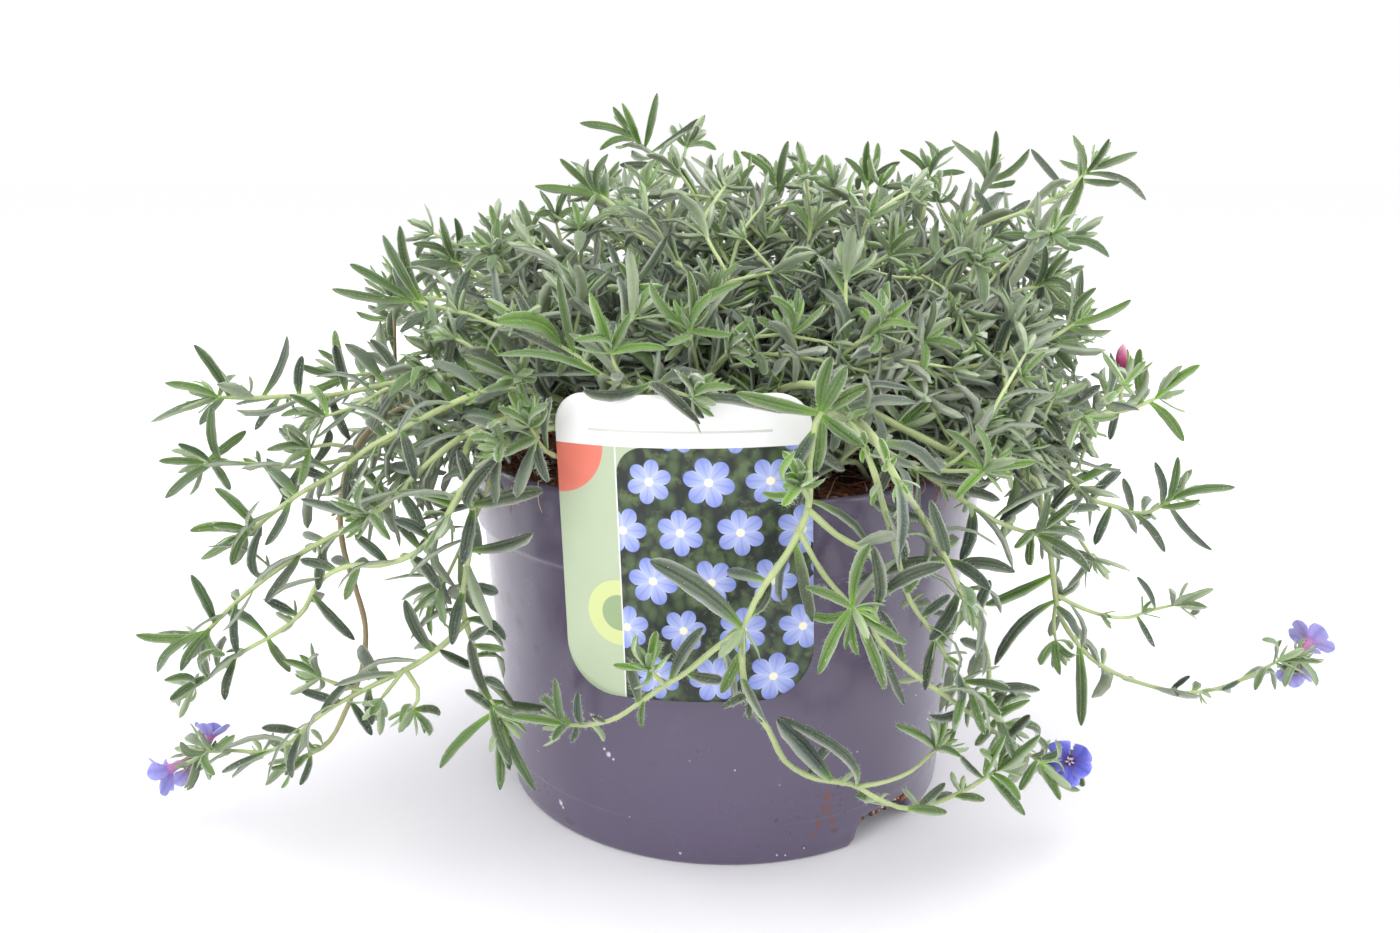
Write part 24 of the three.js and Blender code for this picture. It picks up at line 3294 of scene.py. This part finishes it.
HAIR_T = srgb(176, 190, 164)
leaf_mat = leaf_material("foliage")

LEAF_HAIRS = 1
stem_hair_count = 0


def stem_hairs(b, c, rad, count, r, tone):
    n = len(c)
    if n < 3 or count < 1:
        return
    T, N, B = frames(c)
    x = r.uniform(0, n - 1.001, count)
    k = x.astype(int)
    f = (x - k)[:, None]
    p = c[k] * (1 - f) + c[k + 1] * f
    a = r.uniform(0, 6.283, count)
    e = N[k] * np.cos(a)[:, None] + B[k] * np.sin(a)[:, None]
    rr = rad[k][:, None]
    out = unit(e + T[k] * r.uniform(-.2, .7, count)[:, None] + r.normal(0, .15, (count, 3)))
    side = unit(np.cross(out, T[k])) * .035
    foot = p + e * rr * .93
    v = np.stack([foot - side, foot + side, foot + out * r.uniform(.5, 1.0, count)[:, None]], 1)
    b.add(v.reshape(-1, 3), None, np.arange(count * 3).reshape(-1, 3), tone)


hidden_bloom = []


def build_shoot(name, stems, seed):
    b = Bag()
    r = np.random.default_rng(seed)
    woody = name in WOODY
    for st in stems:
        pts = np.array(st["p"], float) / 10
        if len(pts) < 3:
            pts = np.vstack([pts[:1], (pts[:1] + pts[1:]) / 2, pts[1:]])
        full = cr(pts, 20)
        c, s = even(full, STEM_STEP * (1.6 if st["f"] else 1))
        r0, r1 = st["r"][0] / 100 * STEM_R, st["r"][1] / 100 * STEM_R
        rad = r0 + (r1 - r0) * s
        # small swellings where the leaves stand
        rad = rad * (1 + .07 * np.sin(s * len(c) * 1.9 + seed)) * np.interp(s, [.97, 1], [1, .55])
        old = st["o"]
        col0 = BARK * .9 if (woody or old) else STEM * .92
        col1 = STEM * (1.0 if not woody else .95)
        k = np.interp(s, [0, .35 if woody else .25, 1], [0, .6, 1])[:, None]
        col = (np.array(BARK) * (1 - k) + np.array(col1) * k) if (woody or old or not st["k"]) else np.tile(col1, (len(c), 1))
        if not st["k"] and not woody and not old:
            k = np.interp(s, [0, .16], [0, 1])[:, None]
            col = np.array(srgb(150, 140, 92)) * (1 - k) + np.array(col1) * k
        if woody:
            kk = np.interp(s, [0, .8, 1], [1, .8, 0])[:, None]
            col = np.array(srgb(158, 132, 104)) * kk + np.array(col1) * (1 - kk)
        col = col * r.uniform(.9, 1.1)
        tube(b, c, rad, 5 if st["f"] else STEM_SIDES, col)
        L = np.linalg.norm(np.diff(c, axis=0), axis=1).sum()
        if LEAF_HAIRS and not st["f"]:
            stem_hairs(b, c, rad, int(L * HAIR_RATE), r, HAIR * .95)
        if name == "shoot_right_fan" and not hidden_bloom:
            hidden_bloom.append(1)
            for P, d in (([87.0, 6.0, 140.0], [.55, -.7, .4]), ([88.5, 4.0, 132.5], [.75, -.6, -.1])):
                P, d = np.array(P), unit(np.array(d))
                n1 = unit(np.cross(d, [0, 0, 1.0]))
                m1 = np.cross(d, n1)
                E = [n1 * math.cos(a) + m1 * math.sin(a) for a in np.arange(5) * 1.2566]
                leaves(b, MID, [P + e * .8 for e in E], [P + e * 6 + d * 1.6 for e in E], [d] * 5, 4.6, .08, 0, 5, 0, profile=PETAL_W,
                       colours=petal_colours(srgb(190, 150, 210), srgb(158, 160, 230), srgb(120, 112, 200), srgb(206, 206, 246)), flat=.3)
        if not st["l"]:
            continue
        A = np.array(st["l"], float).reshape(-1, 11)
        t = A[:, 0] / 1000
        x = t * (len(full) - 1)
        i0 = np.clip(x.astype(int), 0, len(full) - 2)
        f = (x - i0)[:, None]
        B0 = full[i0] * (1 - f) + full[i0 + 1] * f
        T = A[:, 1:4] / 10
        w = A[:, 4] / 10
        bend = A[:, 5] / 100
        young = A[:, 6] / 100
        flag = A[:, 7] > 0
        N = unit(A[:, 8:11] / 100)
        dist = np.linalg.norm(T - B0, axis=1)
        keep = dist > 2.0
        wide = w > 5.5
        w = np.where(wide, w * .82, np.where(flag, w * .7, w * .84))
        bend = bend + np.where(flag, r.normal(.035, .05, len(w)), r.normal(.05, .06, len(w)))
        bend = np.where(r.random(len(w)) < .22, bend + r.uniform(.06, .19, len(w)), bend)
        bend = np.where((r.random(len(w)) < .10) & ~wide, -.6 * bend, bend)
        fill = st["f"] > 0
        for m, lod, hairs in ((flag & keep, HIGH, 56), (~flag & keep, FILL if fill else MID, 0 if fill else 9)):
            if m.any():
                leaves(b, lod, B0[m], T[m], N[m], w[m], bend[m], young[m] * .9, int(r.integers(1 << 30)), hairs,
                       tone=r.uniform(0, .5, int(m.sum())) if fill else r.uniform(0, .42, int(m.sum())) if lod is HIGH else None, hair_len=(.6, 1.25) if lod is HIGH else (.45, .95))
        tufts(b, st, c, s, r, fill)
    return b


FILL = Lod([0, .2, .52, .83, 1], [-1, -.45, .45, 1], [-.52, .06, .06, -.52], [], [])


def tufts(b, st, c, s, r, fill):
    """Small bright leaves at the stem's tip and in some of its axils."""
    T, N, B = frames(c)
    spots = [(len(c) - 1, 7 if not fill else 5, 1.0)]
    if not fill:
        k = 3
        while k < len(c) - 4:
            k += int(r.integers(2, 5))
            if k < len(c) - 3 and s[k] > .35 and r.random() < .45:
                spots.append((k, int(r.integers(3, 6)), .62))
    Bs, Ts, Ns, Ws, Ys = [], [], [], [], []
    for k, count, size in spots:
        a0 = r.uniform(0, 6.283)
        e0 = N[k] * math.cos(a0) + B[k] * math.sin(a0)
        axis = T[k] if size == 1 else unit(T[k] * .7 + e0 * .8)
        u1 = unit(np.cross(axis, [.3, .2, 1.0]))
        u2 = np.cross(axis, u1)
        for i in range(count):
            a = a0 + i * 2.39996
            tilt = np.interp(i, [0, count - 1], [1.0, .25]) * r.uniform(.85, 1.15)
            L = np.interp(i, [0, count - 1], [9.5, 4.5]) * size * r.uniform(.85, 1.15)
            e = u1 * math.cos(a) + u2 * math.sin(a)
            d = unit(axis * math.cos(tilt) + e * math.sin(tilt))
            Bs.append(c[k] - axis * .4)
            Ts.append(c[k] + d * L)
            Ns.append(unit(axis - d * (axis @ d) + 1e-6))
            Ws.append(np.interp(L, [3, 9], [1.1, 2.3]))
            Ys.append(np.interp(i, [0, count - 1], [.55, 1.0]))
    n = len(Bs)
    if n:
        leaves(b, TUFT if any(st["l"][7::11]) else PLAIN, Bs, Ts, Ns, Ws, r.uniform(-.10, .06, n), Ys, int(r.integers(1 << 30)), 0 if fill else 5)


PLAIN = Lod([0, .25, .55, .82, 1.0], [-1, 0, 1], [-.34, .04, -.34], [], [])
TUFT = Lod([0, .2, .45, .7, .9, 1.0], [-1, -.5, 0, .5, 1], [-.35, .05, -.16, .05, -.35], [0], [-.5])
STEM_STEP = 3.0
STEM_SIDES = 8
HAIR_RATE = 4.2
STEM_R = .8
WOODY = {"shoot_left_woody"}

order = []
for st in STEMS:
    if st["n"] not in order:
        order.append(st["n"])
total = 0
for i, name in enumerate(order):
    b = build_shoot(name, [s for s in STEMS if s["n"] == name], 100 + i)
    total += b.tris()
    o = b.make("leafy_" + name[6:], leaf_mat)
    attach(o, "root")
    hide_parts(name)


# ---------------------------------------------------------------- flowers
def build_flower(f, seed):
    b = Bag()
    r = np.random.default_rng(seed)
    P, d = np.array(f["throat"], float), unit(np.array(f["aim"], float))
    size, L = f["size"], f["tube"]
    deep = f.get("deep", 0)
    inner = np.array(srgb(168, 120, 176)) * (1 - deep) + np.array(srgb(96, 84, 190)) * deep
    outer = np.array(srgb(150, 152, 226)) * (1 - deep) + np.array(srgb(104, 112, 224)) * deep
    vein = np.array(srgb(104, 96, 190)) * (1 - deep) + np.array(srgb(70, 66, 176)) * deep
    pale = np.array(srgb(206, 204, 244)) * (1 - deep) + np.array(srgb(166, 172, 244)) * deep
    n = np.cross(d, [0, 0, 1.0])
    n = unit(n if np.linalg.norm(n) > .05 else np.cross(d, [1.0, 0, 0]))
    m = np.cross(d, n)
    # the tube, hairy and flushed with pink
    s = np.linspace(0, 1, 10)
    bow = (n * r.uniform(-.5, .5) + m * r.uniform(-.5, .5)) * .6
    c = P - d * L * (1 - s)[:, None] + bow * np.sin(s * math.pi)[:, None]
    rad = np.interp(s, [0, .3, .75, 1], [.75, .8, 1.15, 1.75])
    k = s[:, None]
    col = np.array(srgb(196, 112, 132)) * (1 - k) + (np.array(srgb(178, 118, 176)) * .6 + inner * .4) * k
    tube(b, c, rad, 14, col, cap=False)
    # the inside wall of the tube is painted 20% darker, as shade
    tube(b, c[::-1] + 0, rad[::-1] * .86, 14, (col * .8)[::-1], cap=False)
    if LEAF_HAIRS:
        stem_hairs(b, c, rad, 70, r, np.array(srgb(226, 214, 220)))
    # five petals
    B_, T_, N_, W_ = [], [], [], []
    for i in range(5):
        a = f.get("turn", 0) + i * 2 * math.pi / 5
        e = n * math.cos(a) + m * math.sin(a)
        lift = f.get("lift", .25) + r.uniform(-.1, .1)
        sz = size * r.uniform(.92, 1.05)
        tip = P + e * sz * math.cos(lift) + d * sz * math.sin(lift)
        B_.append(P + e * 1.1 - d * .5)
        T_.append(tip)
        N_.append(d * math.cos(lift) - e * math.sin(lift))
        W_.append(size * .88)
    leaves(b, HIGH, B_, T_, N_, W_, [r.uniform(-.02, .16) for _ in range(5)], 0, seed + 7, 0, profile=PETAL_W,
           colours=petal_colours(inner, outer, vein, pale), flat=.3)
    # calyx: five narrow hairy sepals round the tube's foot, and two bracts
    foot = P - d * L
    sB, sT, sN, sW = [], [], [], []
    for i in range(7):
        a = f.get("turn", 0) + .6 + i * 2 * math.pi / 5
        e = n * math.cos(a) + m * math.sin(a)
        if i < 5:
            k = r.uniform(.30, .62)
            tip = foot + d * L * .72 * math.cos(k) + e * (1.0 + L * .72 * math.sin(k))
            w_ = 1.15
        else:
            k = r.uniform(.7, 1.1)
            tip = foot + d * 8.5 * math.cos(k) + e * 8.5 * math.sin(k)
            w_ = 2.3
        sB.append(foot + e * .3 - d * .6)
        sT.append(tip)
        sN.append(unit(d * .5 - e))
        sW.append(w_)
    leaves(b, HIGH, sB, sT, sN, sW, -.05, r.uniform(.1, .5, 7), seed + 9, 16)
    # throat scales, pale
    for i in range(5):
        a = f.get("turn", 0) + i * 2 * math.pi / 5
        e = n * math.cos(a) + m * math.sin(a)
        c2 = np.array([P + e * 1.2 - d * .5, P + e * .8 + d * .25, P + e * .35 + d * .1])
        tube(b, c2, np.array([.3, .34, .16]), 6, np.array(srgb(222, 206, 232)))
    return b


petal_mat = vertex_material("petal", .6, 1200.0, .92, 1.06, bump=.3, dist=.00012, sheen=.3, spec=.3)
for i, (name, f) in enumerate(FLOWERS.items()):
    o = build_flower(f, 500 + i).make("bloom_" + name[7:], petal_mat)
    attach(o, "root")
    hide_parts(name)


def build_bud():
    b = Bag()
    r = np.random.default_rng(71)
    P, d = np.array(BUD["foot"], float), unit(np.array(BUD["aim"], float))
    n = unit(np.cross(d, [0, 1.0, 0]))
    m = np.cross(d, n)
    s = np.linspace(0, 1, 16)
    c = P + d * BUD["length"] * s[:, None] + n * (.5 * np.sin(s * 3.1))[:, None]
    rad = np.interp(s, [0, .15, .45, .7, .88, .96, 1], [.8, 1.1, 1.5, 1.25, .8, .5, .2])
    tube(b, c, rad, 14, col=np.outer(np.interp(s, [0, .4, 1], [1, 1, 1]), srgb(176, 54, 112)) * (1 - s[:, None] ** 4) + np.outer(s ** 4, srgb(236, 196, 214)))
    v = b.v[0].reshape(16, 14, 3)
    tw = np.sin(np.arange(14)[None] / 14 * 2 * math.pi * 5 + s[:, None] * 5) * .13 * np.interp(s, [0, .3, .9, 1], [0, 1, .7, 0])[:, None]
    out = unit(v - c[:, None])
    b.v[0] = (v + out * tw[..., None]).reshape(-1, 3)
    # the bud's raised twists are painted lighter and its grooves darker, as light and shade
    relief_shaded_col = b.c[0].reshape(16, 14, 3) * (1 + tw[..., None] * 1.6)
    b.c[0] = relief_shaded_col.reshape(-1, 3)
    if LEAF_HAIRS:
        stem_hairs(b, c, rad, 90, r, np.array(srgb(238, 214, 226)))
    return b


bud = build_bud().make("bloom_bud", petal_mat)
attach(bud, "root")
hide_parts("flower_bud")


# ---------------------------------------------------------------- floor
def floor_material():
    n = Nodes("studio_floor")
    o = n.coord()
    f = n.noise(o, 3.0, 2.0)
    near = n.mix(f, (.80, .79, .825), (.82, .81, .845))
    # the floor is painted lighter away from the pot, to near white beyond 1.8 m, standing in for light so it blends
    # into the white world
    far = n.step(n.vmath("LENGTH", o), .35, 1.8)
    return n.finish(n.mix(far, near, (.995, .995, .995)), .7, **{"Specular IOR Level": .1})


g = 40000.0
floor = make("studio_ground", [(-g, -g, 0), (g, -g, 0), (g, g, 0), (-g, g, 0)], [(0, 1, 2, 3)], None, None, None, None, floor_material(), False)
